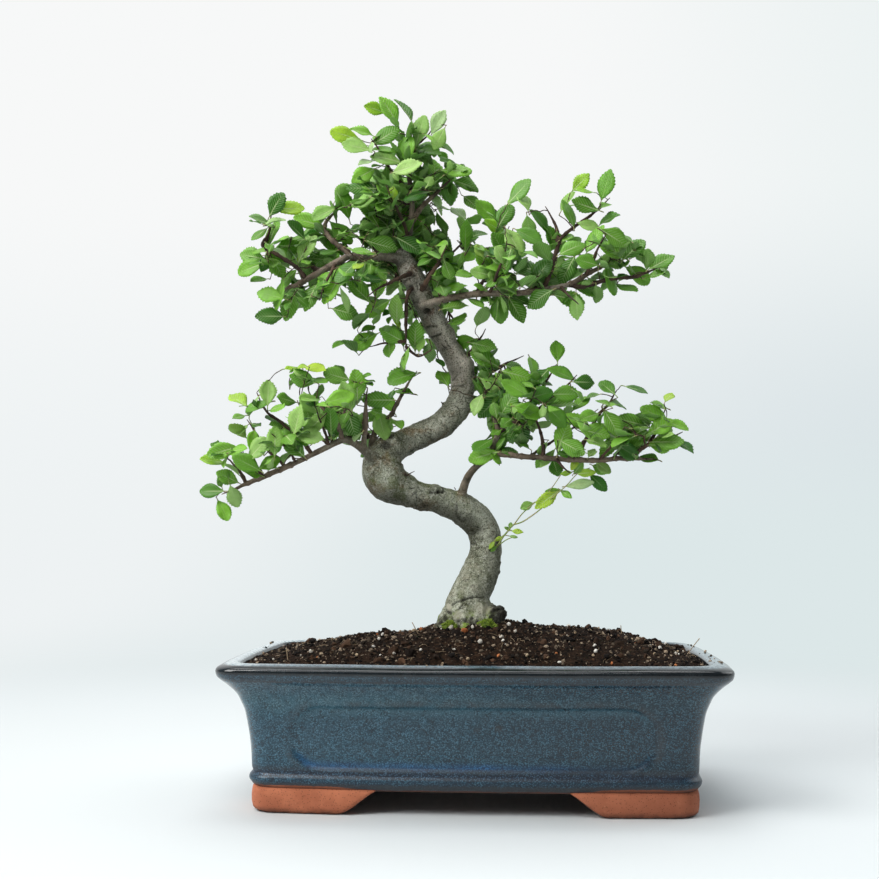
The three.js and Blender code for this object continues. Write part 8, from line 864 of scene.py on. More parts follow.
    [(-11, 26.6, 269.4, 0.45), (-12.2, 26.4, 273.4, 0.41), (-13, 26.4, 276.8, 0.41), (-15, 30.4, 277.9, 0.34), (-15.6, 34.7, 277, 0.34), (-19.6, 36.4, 277.3, 0.32)],
    [(-7.1, 28.8, 264.1, 0.32), (-8.8, 31.2, 262.7, 0.32), (-12.1, 33, 261.2, 0.32)],
    [(-9.2, 23.5, 261.4, 0.34), (-10.2, 26.4, 258.8, 0.34), (-10.4, 29.1, 253.3, 0.32), (-10.4, 31.3, 249.5, 0.32)],
    [(-46.6, 75, 339.3, 0.46), (-46.8, 71.1, 344, 0.46), (-51.4, 71.4, 345.8, 0.34), (-55.4, 72.3, 346.2, 0.34), (-59.6, 73.6, 349, 0.32), (-62.4, 74.3, 352.7, 0.32)],
    [(-46.8, 71.1, 344, 0.35), (-41.9, 73.2, 346.8, 0.32)],
    [(-44, 72.7, 337.1, 0.34), (-47.3, 70.4, 336.5, 0.34), (-50.7, 67.1, 334.2, 0.34), (-53.4, 62.9, 334.1, 0.32)],
    [(-42.7, 71.5, 336, 0.32), (-43.1, 72.8, 334.9, 0.32)],
    [(-40.1, 69.2, 333.7, 0.71), (-35.4, 70.3, 337.5, 0.71), (-34.4, 67.4, 337.5, 0.68), (-31.8, 66.5, 336.5, 0.65), (-30.4, 62.6, 337.6, 0.55), (-31, 60.1, 340.7, 0.55), (-34.8, 58.2, 341.8, 0.41), (-39, 57, 342.2, 0.41), (-42.9, 55.6, 339.4, 0.34), (-46.1, 54.2, 337, 0.34), (-46.5, 50.1, 338.2, 0.32), (-46.3, 45.9, 341, 0.32)],
    [(-31, 60.1, 340.7, 0.35), (-33.9, 59.3, 344.7, 0.32), (-36.9, 60.2, 348, 0.32), (-39.6, 61, 350.4, 0.32)],
    [(-31, 60.1, 340.7, 0.35), (-28.5, 60.5, 342.3, 0.32)],
    [(-31.8, 66.5, 336.5, 0.38), (-30.2, 65.1, 335.1, 0.34), (-28.4, 64.5, 331, 0.32), (-27.6, 66.3, 327.4, 0.32)],
    [(-38.8, 68, 332.6, 0.32), (-40.9, 65.6, 333.7, 0.32)],
    [(-36.7, 65.1, 330.2, 0.32), (-34.4, 67.4, 328.1, 0.32)],
    [(-36.7, 65.1, 330.2, 0.34), (-39.2, 65, 329, 0.34), (-42.3, 65.4, 324.4, 0.32)],
    [(-33.6, 60.9, 326.5, 0.58), (-37.2, 58.6, 325.8, 0.58), (-41.5, 56.2, 324.9, 0.58), (-40.3, 53.3, 325.3, 0.55), (-37.6, 50.8, 326, 0.51), (-36.3, 47.6, 326.6, 0.51), (-37, 43.2, 327.1, 0.46), (-40.3, 40.2, 325.9, 0.41), (-43.7, 39.8, 323.4, 0.34), (-48, 41.3, 325.8, 0.32), (-51.4, 43.1, 328.1, 0.32)],
    [(-40.3, 40.2, 325.9, 0.35), (-42, 35.9, 329.7, 0.32)],
    [(-31.6, 58, 324, 0.32), (-31.4, 55.7, 328.9, 0.32), (-32.1, 52.7, 332.7, 0.32)],
    [(-31.6, 58, 324, 0.32), (-31.2, 60.3, 322.4, 0.32)],
    [(-26.3, 45.6, 314.6, 0.34), (-29.1, 44.9, 312.3, 0.34), (-31.6, 44.2, 310.4, 0.34), (-34.4, 47.4, 307.5, 0.32), (-35.7, 51.2, 305.4, 0.32)],
    [(-26.3, 45.6, 314.6, 0.32), (-25.5, 43.3, 319.7, 0.32)],
    [(-23.9, 37.6, 308.9, 0.73), (-19.4, 39.8, 308.3, 0.73), (-19.4, 43.6, 309.9, 0.68), (-19.8, 45.7, 314.5, 0.55), (-20, 46.2, 319.3, 0.55), (-19.3, 48.9, 323.6, 0.51), (-18.5, 51.5, 327.3, 0.51), (-20.1, 54.6, 324.6, 0.46), (-21.2, 56.7, 321.3, 0.46), (-22.5, 58.9, 316.6, 0.46), (-23.7, 62.2, 315.2, 0.41), (-24.6, 65.3, 313.5, 0.41), (-28.9, 68.4, 311.5, 0.34), (-33.5, 70.4, 310.1, 0.34), (-36.7, 67.6, 315.2, 0.32)],
    [(-19.4, 43.6, 309.9, 0.45), (-20.4, 47.1, 307.8, 0.41), (-20.7, 50.5, 305.1, 0.41), (-21.6, 52.4, 303, 0.41), (-18.8, 50.1, 299.9, 0.34), (-17.5, 47.7, 296, 0.32), (-16.4, 46, 290.9, 0.32)],
    [(-19.4, 39.8, 308.3, 0.35), (-21.4, 39.1, 304.2, 0.32)],
    [(-23.4, 36, 307.7, 0.46), (-25.4, 35.2, 307.6, 0.46), (-28.4, 32.6, 309.9, 0.41), (-31, 29.2, 311.9, 0.34), (-32, 27.1, 313.5, 0.34), (-26.8, 26.4, 314.1, 0.32)],
    [(-22.5, 32.8, 305.5, 0.71), (-19.5, 32.6, 307.7, 0.71), (-16.4, 31.9, 310.8, 0.71), (-18.4, 31.4, 315, 0.68), (-20.2, 30.5, 319.1, 0.68), (-20, 28.2, 322.2, 0.65), (-19.2, 30.7, 325.2, 0.58), (-22, 33.9, 326.8, 0.46), (-25.9, 34.5, 325.7, 0.41), (-28.8, 31.1, 325, 0.34), (-31, 28.5, 325.4, 0.34), (-34.6, 28.5, 326.5, 0.32)],
    [(-25.9, 34.5, 325.7, 0.35), (-29, 33.8, 323.5, 0.32), (-32.4, 32.5, 321.1, 0.32)],
    [(-22, 33.9, 326.8, 0.35), (-25.2, 35.8, 328.1, 0.32)],
    [(-19.2, 30.7, 325.2, 0.35), (-15.9, 30.8, 326.1, 0.32), (-12.2, 31.1, 324.6, 0.32)],
    [(-19.2, 30.7, 325.2, 0.38), (-16.8, 34.3, 327.5, 0.34), (-15.2, 38.3, 330.4, 0.32), (-13.3, 43.1, 333, 0.32), (-13.2, 46.2, 335.5, 0.32)],
    [(-20, 28.2, 322.2, 0.38), (-20.1, 24.4, 324, 0.34), (-20.9, 20.9, 321.8, 0.32), (-23.5, 17.3, 320.4, 0.32), (-25.3, 15.1, 317.4, 0.32)],
    [(-20.9, 26.2, 300.7, 0.32), (-20.8, 24.4, 304.1, 0.32), (-20.8, 23.1, 308.3, 0.32)],
    [(-20.9, 26.2, 300.7, 0.34), (-22.2, 31.2, 297.2, 0.34), (-23.3, 35.4, 294.3, 0.32)],
    [(-20.6, 24.5, 299.4, 0.41), (-24.2, 23.9, 301.9, 0.41), (-26.2, 23.5, 299.8, 0.32)],
    [(-24.2, 23.9, 301.9, 0.35), (-29.8, 21.3, 303.9, 0.32), (-33, 19, 304.8, 0.32)],
    [(-20.4, 22.8, 298.1, 0.55), (-22.9, 24.5, 295.1, 0.55), (-25.3, 27.4, 292, 0.55), (-27.4, 31.5, 288.5, 0.51), (-27, 34.8, 285, 0.46), (-25, 39.1, 282.1, 0.46), (-24.1, 42.2, 279, 0.46), (-22.3, 44.3, 276.8, 0.46), (-21.4, 43.5, 272.7, 0.41), (-20.7, 40.8, 269.2, 0.41), (-20.6, 41.9, 265.3, 0.34), (-19.8, 43.6, 261.7, 0.34), (-20.4, 46.1, 258.7, 0.32)],
    [(-19.8, 43.6, 261.7, 0.34), (-17.3, 45.5, 259.8, 0.32), (-14, 47.5, 258.8, 0.32)],
    [(-20.7, 40.8, 269.2, 0.35), (-19.6, 38.8, 265.6, 0.32)],
    [(-19.5, 17.5, 294.1, 0.34), (-18.3, 15.8, 298.1, 0.34), (-16.7, 14.3, 301.7, 0.34), (-21.2, 14.9, 306.5, 0.32)],
    [(-19.5, 17.5, 294.1, 0.32), (-21.4, 16, 296.3, 0.32)],
    [(-19.3, 15.8, 292.8, 0.32), (-22, 17, 293, 0.32)],
    [(-65.9, 68, 395.7, 0.32), (-69, 68.3, 399, 0.32), (-72.9, 66.7, 402.2, 0.32)],
    [(-62.4, 63.4, 388.9, 0.62), (-65.4, 65.6, 387.2, 0.62), (-68.4, 68.8, 384, 0.55), (-69, 69, 379.9, 0.46), (-69.1, 69.4, 377.3, 0.46), (-65.2, 71.3, 374.6, 0.41), (-62.9, 69.6, 370.1, 0.34), (-58.3, 67.3, 368, 0.32)],
    [(-65.2, 71.3, 374.6, 0.35), (-63.5, 73.8, 372.7, 0.32)],
    [(-68.4, 68.8, 384, 0.35), (-72.3, 71.8, 386, 0.32)],
    [(-65.4, 65.6, 387.2, 0.38), (-70.6, 65.4, 387.6, 0.34), (-75.2, 64.1, 388.1, 0.32)],
    [(-70.6, 65.4, 387.6, 0.34), (-75.3, 66.5, 386.8, 0.32), (-79.7, 67.7, 385.9, 0.32), (-82.8, 68.7, 385, 0.32)],
    [(-62.4, 63.4, 388.9, 0.32), (-64.4, 60.8, 389.4, 0.32), (-67.2, 57.4, 389.7, 0.32)],
    [(-62.4, 63.4, 388.9, 0.87), (-59.4, 67.4, 386.9, 0.87), (-58.2, 69.9, 387.7, 0.85), (-54.5, 71.5, 390.4, 0.83), (-49.1, 69.6, 389.4, 0.8), (-46.5, 66.1, 386.2, 0.76), (-44.2, 61.3, 389.7, 0.73), (-44.6, 58.8, 389.5, 0.71), (-49.2, 55.4, 391.1, 0.62), (-52, 57.6, 392.7, 0.46), (-53.9, 61, 393.7, 0.46), (-56.1, 65.7, 396.4, 0.41), (-57, 68.9, 398.9, 0.41), (-56, 70.2, 403.3, 0.34), (-54.6, 70.2, 406.9, 0.34), (-52.8, 70.2, 410.3, 0.34), (-54.8, 70.6, 413.7, 0.32), (-57.8, 69.8, 415, 0.32), (-61.8, 70.1, 417.1, 0.32)],
    [(-49.2, 55.4, 391.1, 0.45), (-50.7, 51.1, 392.5, 0.41), (-49.4, 47.2, 393.7, 0.41), (-47.3, 49.7, 397.8, 0.34), (-45.5, 52.4, 402.1, 0.32), (-42.7, 55.5, 404.8, 0.32), (-41.7, 57.7, 408, 0.32)],
    [(-44.6, 58.8, 389.5, 0.38), (-43.4, 56.2, 385.2, 0.34), (-42.4, 54.6, 381.5, 0.34), (-47, 52.2, 381.6, 0.32)],
    [(-49.1, 69.6, 389.4, 0.35), (-44.6, 72.9, 387.4, 0.32)],
    [(-60.7, 61.1, 385.5, 0.46), (-64.9, 60.1, 384.1, 0.46), (-68.3, 58.3, 382.8, 0.46), (-71.4, 54.8, 378, 0.41), (-73.6, 57.1, 377.3, 0.34), (-76.3, 56.8, 377, 0.32)],
    [(-57.1, 54.7, 377.9, 0.32), (-57.1, 51.2, 380.8, 0.32), (-56.7, 48.5, 383.4, 0.32)],
    [(-55, 50.7, 373.4, 0.51), (-59.1, 54.1, 369.5, 0.51), (-60.3, 54.1, 366.5, 0.41), (-56.7, 55.8, 365.1, 0.34), (-53.4, 57.9, 364.8, 0.34), (-53, 59.1, 370.9, 0.32)],
    [(-59.1, 54.1, 369.5, 0.35), (-63, 55.7, 367.9, 0.32), (-65.8, 56.1, 367.4, 0.32)],
    [(-54.3, 49.3, 371.9, 0.58), (-50.5, 51.7, 372.9, 0.58), (-45, 54.7, 372.4, 0.58), (-42.4, 57.5, 374.1, 0.55), (-40.7, 60.2, 375.8, 0.55), (-42.3, 64.5, 372.6, 0.41), (-42.6, 65.8, 367.3, 0.34), (-43.5, 66.3, 363.6, 0.34), (-45.5, 67.1, 361.8, 0.32)],
    [(-40.7, 60.2, 375.8, 0.35), (-36.6, 63.5, 374.6, 0.32), (-33, 66.4, 374.4, 0.32), (-29.4, 67.6, 372.5, 0.32)],
    [(-40.7, 60.2, 375.8, 0.38), (-40.1, 63.6, 377.9, 0.34), (-37.4, 65.7, 381.9, 0.32), (-35, 66.2, 385.4, 0.32)],
    [(-51.9, 43.2, 366.5, 0.34), (-54.1, 45.6, 363.6, 0.34), (-56.7, 48.5, 360, 0.34), (-58.6, 52.6, 357.8, 0.32), (-60.1, 57.1, 356.4, 0.32), (-61.4, 60.2, 355.3, 0.32)],
    [(-51.9, 43.2, 366.5, 0.58), (-52.2, 41.4, 367.9, 0.58), (-53, 38.1, 369.4, 0.55), (-53, 34.7, 371, 0.55), (-49.1, 30.1, 370.1, 0.41), (-49.5, 25.3, 370, 0.34), (-51.6, 25.1, 366.1, 0.32)],
    [(-53, 34.7, 371, 0.38), (-51.4, 34.2, 374.9, 0.34), (-46.4, 35, 375.1, 0.32)],
    [(-50.1, 38.4, 362.5, 0.32), (-46.3, 41.1, 362.8, 0.32), (-42.8, 45.8, 361.2, 0.32)],
    [(-49.6, 36.8, 361.1, 0.32), (-49.8, 39.9, 359.1, 0.32), (-49.6, 43, 356.7, 0.32), (-50.4, 46.2, 353.7, 0.32)],
    [(-48.4, 33.6, 358.5, 0.34), (-51.8, 34.1, 356.5, 0.34), (-54.5, 31.3, 357.1, 0.32)],
    [(-47.8, 32, 357.1, 0.32), (-43.6, 32.9, 359.1, 0.32), (-40.2, 33.6, 361, 0.32)],
    [(-47.8, 32, 357.1, 0.32), (-49, 30.6, 359.5, 0.32)],
    [(-47, 28.8, 354.6, 0.34), (-48.2, 31.8, 351.1, 0.34), (-48.3, 31.4, 348.9, 0.32)],
    [(-45.7, 24, 350.7, 0.55), (-44.5, 28, 349.4, 0.55), (-41.1, 31.8, 349.8, 0.51), (-37.7, 35.2, 350.9, 0.51), (-36.2, 36.1, 347.6, 0.41), (-34.8, 36.5, 344.4, 0.41), (-33.5, 41.5, 343, 0.34), (-33.7, 46.1, 343.4, 0.32)],
    [(-33.5, 41.5, 343, 0.34), (-31.5, 43.6, 346.3, 0.32), (-30.7, 44.7, 350.1, 0.32)],
    [(-37.7, 35.2, 350.9, 0.35), (-37.4, 38.9, 354.3, 0.32)],
    [(-44.5, 28, 349.4, 0.35), (-43.4, 33.2, 346.6, 0.32)],
    [(-45.7, 24, 350.7, 0.58), (-49.8, 23.1, 352.2, 0.58), (-52.7, 20.8, 351.6, 0.51), (-54.8, 18.5, 351.7, 0.51), (-58.9, 19.4, 352.3, 0.46), (-62.5, 20.6, 353.8, 0.34), (-63.4, 21.8, 355.4, 0.32)],
    [(-58.9, 19.4, 352.3, 0.38), (-63, 16.8, 349.9, 0.34), (-59.9, 13.2, 347.8, 0.32)],
    [(-49.8, 23.1, 352.2, 0.35), (-54.4, 24.7, 348.9, 0.32)],
    [(-45.3, 22.4, 349.4, 0.32), (-46.7, 25.7, 346, 0.32), (-48, 29, 342.8, 0.32)],
    [(-45.3, 22.4, 349.4, 0.32), (-47.7, 23.8, 348.3, 0.32)],
    [(-44, 17.6, 345.5, 0.34), (-40.5, 17.8, 347.3, 0.34), (-36.9, 18.5, 347.7, 0.34), (-32.6, 18.6, 349, 0.32), (-31, 17.9, 351.1, 0.32)],
    [(-43.3, 14.4, 343, 0.32), (-47.1, 14.2, 342.3, 0.32)],
    [(-42.2, 8.2, 338.1, 0.32), (-41.1, 11.6, 334.1, 0.32)],
    [(-42.2, 8.2, 338.1, 0.46), (-43.8, 7.7, 340.3, 0.46), (-44.9, 8.5, 344.6, 0.41), (-48.6, 4.6, 343.9, 0.34), (-48.9, 4.3, 346.6, 0.32)],
    [(-41.3, 3.6, 334.4, 0.93), (-47.7, 4.3, 332.6, 0.93), (-53, 2.8, 334.4, 0.91), (-53, 2.5, 337.7, 0.85), (-53.8, 7.5, 339.4, 0.78), (-53.2, 13.1, 339.3, 0.78), (-52.8, 17.9, 338.6, 0.62), (-52.3, 21.2, 338.1, 0.62), (-52.7, 24.9, 338.8, 0.62), (-55.3, 27.8, 340.6, 0.58), (-56.6, 31.9, 343.2, 0.55), (-59.4, 33.1, 345.6, 0.46), (-63, 35.8, 346.7, 0.41), (-65.9, 36.4, 348.2, 0.41), (-66.8, 35.6, 351.8, 0.34), (-66.5, 34.2, 355, 0.34), (-66.4, 34, 359.2, 0.32), (-66.7, 35.3, 362.3, 0.32)],
    [(-59.4, 33.1, 345.6, 0.35), (-64.6, 31.5, 347.3, 0.32), (-68, 28.3, 347.5, 0.32)],
    [(-56.6, 31.9, 343.2, 0.38), (-57, 35.4, 345.5, 0.34), (-57.7, 40, 347.6, 0.32), (-59, 44.4, 349.8, 0.32)],
    [(-53.2, 13.1, 339.3, 0.56), (-51.6, 14, 335, 0.51), (-50.6, 13.3, 330.7, 0.51), (-48.8, 12.2, 326, 0.51), (-47.1, 14.6, 320.6, 0.46), (-44.4, 16.2, 316.4, 0.46), (-42.5, 19.5, 312.9, 0.46), (-41.2, 22.3, 310.3, 0.46), (-43.8, 24.8, 307.7, 0.41), (-45, 30.2, 307.3, 0.34), (-45.4, 35.5, 308.2, 0.32), (-44.5, 39.6, 309.5, 0.32), (-44.2, 44.5, 311.6, 0.32)],
    [(-45, 30.2, 307.3, 0.34), (-44.6, 34, 303.5, 0.32), (-43, 36.8, 300, 0.32), (-41.4, 39.1, 295.1, 0.32)],
    [(-53, 2.5, 337.7, 0.38), (-55.7, 1.1, 342.6, 0.34), (-59.6, -1, 345.1, 0.32)],
    [(-55.7, 1.1, 342.6, 0.34), (-57, -5, 342.2, 0.32)],
    [(-53, 2.8, 334.4, 0.38), (-53.4, -1.2, 333.7, 0.34), (-51.5, -3.6, 335.1, 0.32)],
    [(-41.3, 3.6, 334.4, 0.34), (-38.3, 3.8, 334, 0.34), (-35.7, 2.2, 333.6, 0.32)],
    [(-41, 2, 333.2, 0.34), (-41.5, 5.1, 330.4, 0.34), (-42.9, 7.2, 327, 0.34), (-42.8, 10.4, 324.4, 0.34), (-38.8, 12.2, 322.2, 0.32), (-34.7, 12.9, 321.9, 0.32)],
    [(-89.1, 28.4, 373.9, 0.32), (-91.8, 28.2, 371.6, 0.32), (-95.3, 28.2, 368.9, 0.32)],
    [(-85.7, 24, 370.9, 0.32), (-89.4, 22.2, 369.1, 0.32), (-94.3, 20.7, 368, 0.32)],
    [(-75.4, 8.8, 361.2, 0.32), (-77.3, 7, 362.8, 0.32), (-80.2, 5, 364.3, 0.32)],
    [(-75.4, 8.8, 361.2, 0.32), (-74.2, 9, 365, 0.32)],
    [(-72.3, 4, 358.3, 0.41), (-75.9, 4.7, 355.5, 0.41), (-79.5, 4.3, 352.3, 0.41), (-79.7, 7.9, 348, 0.32)],
    [(-79.5, 4.3, 352.3, 0.35), (-83, 6.1, 350.3, 0.32), (-86.2, 7.6, 348.5, 0.32)],
    [(-71.3, 2.4, 357.4, 0.46), (-75.2, -1.5, 360.5, 0.46), (-76.1, -5.2, 364.3, 0.41), (-79.3, -5.7, 367.2, 0.32), (-83, -5.2, 369.7, 0.32)],
    [(-76.1, -5.2, 364.3, 0.35), (-74.1, -8, 368.2, 0.32), (-70.8, -9.9, 372.4, 0.32)],
    [(-71.3, 2.4, 357.4, 0.32), (-68, 4.6, 359.6, 0.32)],
    [(-70.3, 0.8, 356.4, 0.32), (-71, 3.1, 352.4, 0.32)],
    [(-66.4, -5.5, 352.4, 0.32), (-63.6, -1.3, 351.8, 0.32), (-61, 2, 351.1, 0.32)],
    [(-63, -11.5, 348, 0.32), (-66.9, -12.6, 348.9, 0.32)],
    [(-62.2, -13, 346.9, 0.41), (-62.7, -10.6, 344.4, 0.41), (-64.2, -6.7, 341.4, 0.41), (-64.2, -4, 338.2, 0.41), (-63.3, -5.2, 333.9, 0.34), (-62.5, -7.5, 330.4, 0.34), (-64.9, -8.6, 328.5, 0.32)],
    [(-96.3, -45, 310.6, 0.32), (-98.6, -47.9, 311.9, 0.32), (-101, -50.9, 312.1, 0.32)],
    [(-93.6, -38.7, 323, 0.32), (-89.7, -40.1, 323, 0.32), (-84.9, -41, 321.4, 0.32)],
    [(-93.6, -38.7, 323, 0.32), (-94.4, -42.4, 324.2, 0.32)],
    [(-91.4, -32.5, 331.1, 0.41), (-91.9, -29, 328.8, 0.41), (-91.2, -26.2, 326.2, 0.41), (-91.6, -22.2, 322.7, 0.41), (-89.7, -23.4, 318.2, 0.34), (-89.4, -24.6, 315.2, 0.32)],
    [(-91, -31, 332.7, 0.71), (-86.8, -33.2, 333.7, 0.71), (-84.7, -31.9, 329.9, 0.68), (-81.5, -30.6, 330.3, 0.65), (-78.5, -27.1, 328.2, 0.55), (-77.9, -23.4, 325.1, 0.55), (-76.2, -20.2, 324.6, 0.51), (-75, -14.5, 323.3, 0.46), (-74.5, -10, 321.6, 0.46), (-70.1, -8, 317.8, 0.34), (-65.7, -8.5, 315, 0.34), (-65.5, -5.5, 312.7, 0.32), (-66.8, -2.4, 311.4, 0.32)],
    [(-74.5, -10, 321.6, 0.35), (-76.3, -5.7, 322.1, 0.32), (-78.9, -3.3, 323.5, 0.32)],
    [(-81.5, -30.6, 330.3, 0.38), (-79.5, -32.4, 328.2, 0.34), (-78.3, -36.1, 325.8, 0.34), (-74.4, -38.2, 324.3, 0.32), (-71.4, -39.9, 323.3, 0.32)],
    [(-90.6, -29.5, 334.2, 0.32), (-85.7, -29.4, 334.5, 0.32)],
    [(-109, 22, 330.5, 0.32), (-111.4, 20.6, 332.2, 0.32), (-114.5, 18, 333.1, 0.32)],
    [(-107.7, 20.3, 331.3, 0.32), (-107.7, 19.4, 328.2, 0.32), (-107.4, 18, 323.2, 0.32)],
    [(-101.2, 12, 335.2, 0.32), (-100.5, 16, 337, 0.32), (-99.2, 19.6, 339.4, 0.32)],
    [(-101.2, 12, 335.2, 0.46), (-103.4, 13.1, 341.3, 0.46), (-105.4, 16, 344, 0.41), (-108, 19.9, 345.7, 0.34), (-107.2, 23.8, 347.9, 0.32), (-105, 27.8, 349.2, 0.32), (-102.9, 30.7, 351, 0.32), (-100.2, 34.3, 351.8, 0.32)],
    [(-105.4, 16, 344, 0.35), (-109.7, 17.4, 348.7, 0.32)],
    [(-98.5, 8.6, 336.4, 0.46), (-102.1, 6.6, 337.7, 0.46), (-105.9, 4.2, 338.5, 0.46), (-110.2, 4.4, 339.5, 0.41), (-113.9, 4.9, 339.8, 0.41), (-117.8, 5.2, 339.7, 0.34), (-121.1, 6.1, 339.1, 0.34), (-125.2, 6.7, 340.1, 0.32), (-129.7, 6.9, 342.2, 0.32), (-133, 7.4, 344.6, 0.32)],
    [(-95.8, 5.1, 337.5, 0.32), (-97.3, 2.5, 332.3, 0.32)],
    [(-94.5, 3.4, 338.1, 0.32), (-97.7, 0.8, 338.6, 0.32), (-100, -1.9, 338.1, 0.32), (-103.4, -4.6, 338, 0.32)],
    [(-91.9, 0, 339.3, 0.32), (-89, 3, 336.6, 0.32), (-86.1, 6.4, 334, 0.32)],
    [(-86.3, -6.9, 341.1, 0.32), (-88.8, -6.7, 345.2, 0.32)],
    [(-83.5, -10.3, 342, 0.34), (-86.4, -11.6, 342, 0.34), (-91.1, -12.3, 340.8, 0.32)],
    [(-80.7, -13.8, 342.7, 0.34), (-78, -11.2, 341.8, 0.34), (-74.3, -8.4, 339.9, 0.34), (-73, -3.5, 340.8, 0.32), (-73.3, 1, 341.8, 0.32)],
    [(-79.2, -15.6, 343, 0.32), (-76.2, -12.3, 347.3, 0.32)],
    [(-74.9, -21, 343.8, 0.55), (-74.6, -25.7, 343.1, 0.55), (-73.1, -29.5, 341.4, 0.55), (-72.4, -34.5, 338.7, 0.51), (-71, -38.8, 336.5, 0.46), (-68.7, -43, 335.4, 0.46), (-68, -46.4, 333.9, 0.34), (-66.2, -49.5, 333, 0.32)],
    [(-68, -46.4, 333.9, 0.34), (-70.6, -50.7, 334.5, 0.32), (-73.8, -54.1, 336.7, 0.32), (-76.3, -57.7, 338.2, 0.32), (-79.5, -60.2, 340.4, 0.32)],
    [(-68.7, -43, 335.4, 0.38), (-64, -46.2, 336.6, 0.34), (-59.5, -48.1, 338.1, 0.34), (-60.1, -53, 338.1, 0.32)],
    [(-73.1, -29.5, 341.4, 0.35), (-69.9, -30.7, 338.8, 0.32), (-66, -30.6, 336.9, 0.32)],
    [(-124.4, 2.8, 360.3, 0.32), (-125.2, 6, 362.4, 0.32), (-125.3, 9.2, 363.9, 0.32), (-125.9, 12.9, 365.4, 0.32)],
    [(-122.5, 0.4, 356.9, 0.32), (-119.8, -1.6, 360.4, 0.32)],
    [(-121.6, -0.8, 355.2, 0.32), (-123.1, 2.6, 352, 0.32)],
    [(-121.6, -0.8, 355.2, 0.32), (-119.4, 3.6, 355.4, 0.32)],
    [(-119.5, -3.3, 352.2, 0.41), (-120.9, -6.7, 354.1, 0.41), (-121.5, -10.1, 355.7, 0.41), (-122, -13.5, 356.8, 0.41), (-119.5, -19.5, 357.8, 0.34), (-120.2, -20.6, 354.1, 0.32), (-121.6, -20.5, 349.7, 0.32)],
    [(-119.5, -3.3, 352.2, 0.32), (-122.6, -1.7, 349.6, 0.32)],
    [(-114.9, -8.7, 346.7, 0.32), (-118.7, -9, 345.8, 0.32), (-122.5, -9.5, 344.4, 0.32), (-126.8, -10.8, 343.2, 0.32)],
    [(-113.7, -10, 345.4, 0.34), (-110.6, -7.6, 347.6, 0.34), (-106.4, -5.1, 348.2, 0.34), (-103, -2.5, 349.9, 0.32)],
    [(-106.4, -5.1, 348.2, 0.34), (-106.8, -3.5, 350.8, 0.32), (-107.2, -1.7, 354.1, 0.32)],
    [(-113.7, -10, 345.4, 0.32), (-111.1, -4.7, 343.1, 0.32)],
    [(-108.7, -16, 340.8, 0.41), (-111.6, -21.5, 342.6, 0.41), (-110.7, -24.1, 346, 0.34), (-109.1, -25.4, 348, 0.34), (-108.6, -23.1, 353.2, 0.32)],
    [(-107.4, -17.5, 339.6, 0.34), (-105.9, -12.7, 336.4, 0.34), (-102.5, -10.3, 334.8, 0.32), (-100.5, -9.1, 333.8, 0.32)],
    [(-103.7, -21.7, 336.6, 0.55), (-105.3, -19.5, 333.3, 0.55), (-106, -16.6, 330.6, 0.51), (-105.9, -14.5, 327.9, 0.51), (-109.6, -15, 326, 0.46), (-112.8, -16.3, 325.5, 0.46), (-116.6, -14.8, 326.5, 0.41), (-119.2, -11.7, 327.2, 0.41), (-122.1, -10.2, 325.2, 0.34), (-123.2, -9.9, 321.5, 0.34), (-128, -12.7, 320, 0.32)],
    [(-119.2, -11.7, 327.2, 0.35), (-121.7, -8.8, 328.5, 0.32)],
    [(-103.7, -21.7, 336.6, 0.46), (-105.9, -23.7, 337.2, 0.46), (-108.4, -23.5, 336.2, 0.41), (-113.7, -22.9, 336.8, 0.34), (-115.6, -22.2, 337.8, 0.32)],
    [(-131.8, -26.3, 371.4, 0.32), (-132.4, -31.6, 373.5, 0.32)],
    [(-132.4, -27.3, 364.7, 0.32), (-133.1, -31.3, 366.2, 0.32)],
    [(-132.5, -27.7, 362.6, 0.32), (-128.2, -26.3, 362.6, 0.32)],
    [(-132.5, -27.7, 362.6, 0.34), (-131.3, -31.8, 362, 0.34), (-131.5, -36.1, 360.7, 0.32), (-131.8, -40.4, 360.1, 0.32), (-132.5, -43.7, 359, 0.32), (-132.6, -47.1, 358.1, 0.32)],
    [(-135.3, -29.5, 352.8, 0.34), (-135.3, -26.3, 351.4, 0.34), (-134, -23.2, 350.4, 0.34), (-133.8, -18, 349.1, 0.32)],
    [(-136.3, -30, 350.5, 0.32), (-134.2, -35.7, 350.7, 0.32)],
    [(-134.2, -30.5, 348.7, 0.32), (-134.8, -28.7, 348.5, 0.32)],
    [(-132.1, -31, 346.9, 0.46), (-134, -33, 342, 0.46), (-133.1, -35.6, 339.8, 0.41), (-131.7, -38.2, 338, 0.41), (-130.4, -40.6, 335.8, 0.34), (-129.7, -43.9, 337.8, 0.32), (-130, -46.7, 341, 0.32)],
    [(-132.1, -31, 346.9, 0.32), (-133.4, -29.9, 346.3, 0.32)],
    [(-130.4, -31, 345.8, 0.46), (-131.9, -28.4, 344.1, 0.46), (-134.1, -26.5, 341.5, 0.34), (-136.7, -22.1, 342.4, 0.32)],
    [(-131.9, -28.4, 344.1, 0.38), (-130.1, -27.1, 340.2, 0.34), (-131.2, -25.9, 335.8, 0.32), (-131.8, -24.2, 332.6, 0.32), (-132.9, -23.9, 329, 0.32)],
    [(-114.6, -30, 335.4, 0.32), (-118.3, -31.6, 332.3, 0.32), (-121.4, -32.8, 328.2, 0.32)],
    [(-86.3, -3, 384.7, 0.32), (-83, -3.6, 385.6, 0.32), (-77.7, -3.9, 386, 0.32), (-74.2, -4.4, 385.8, 0.32)],
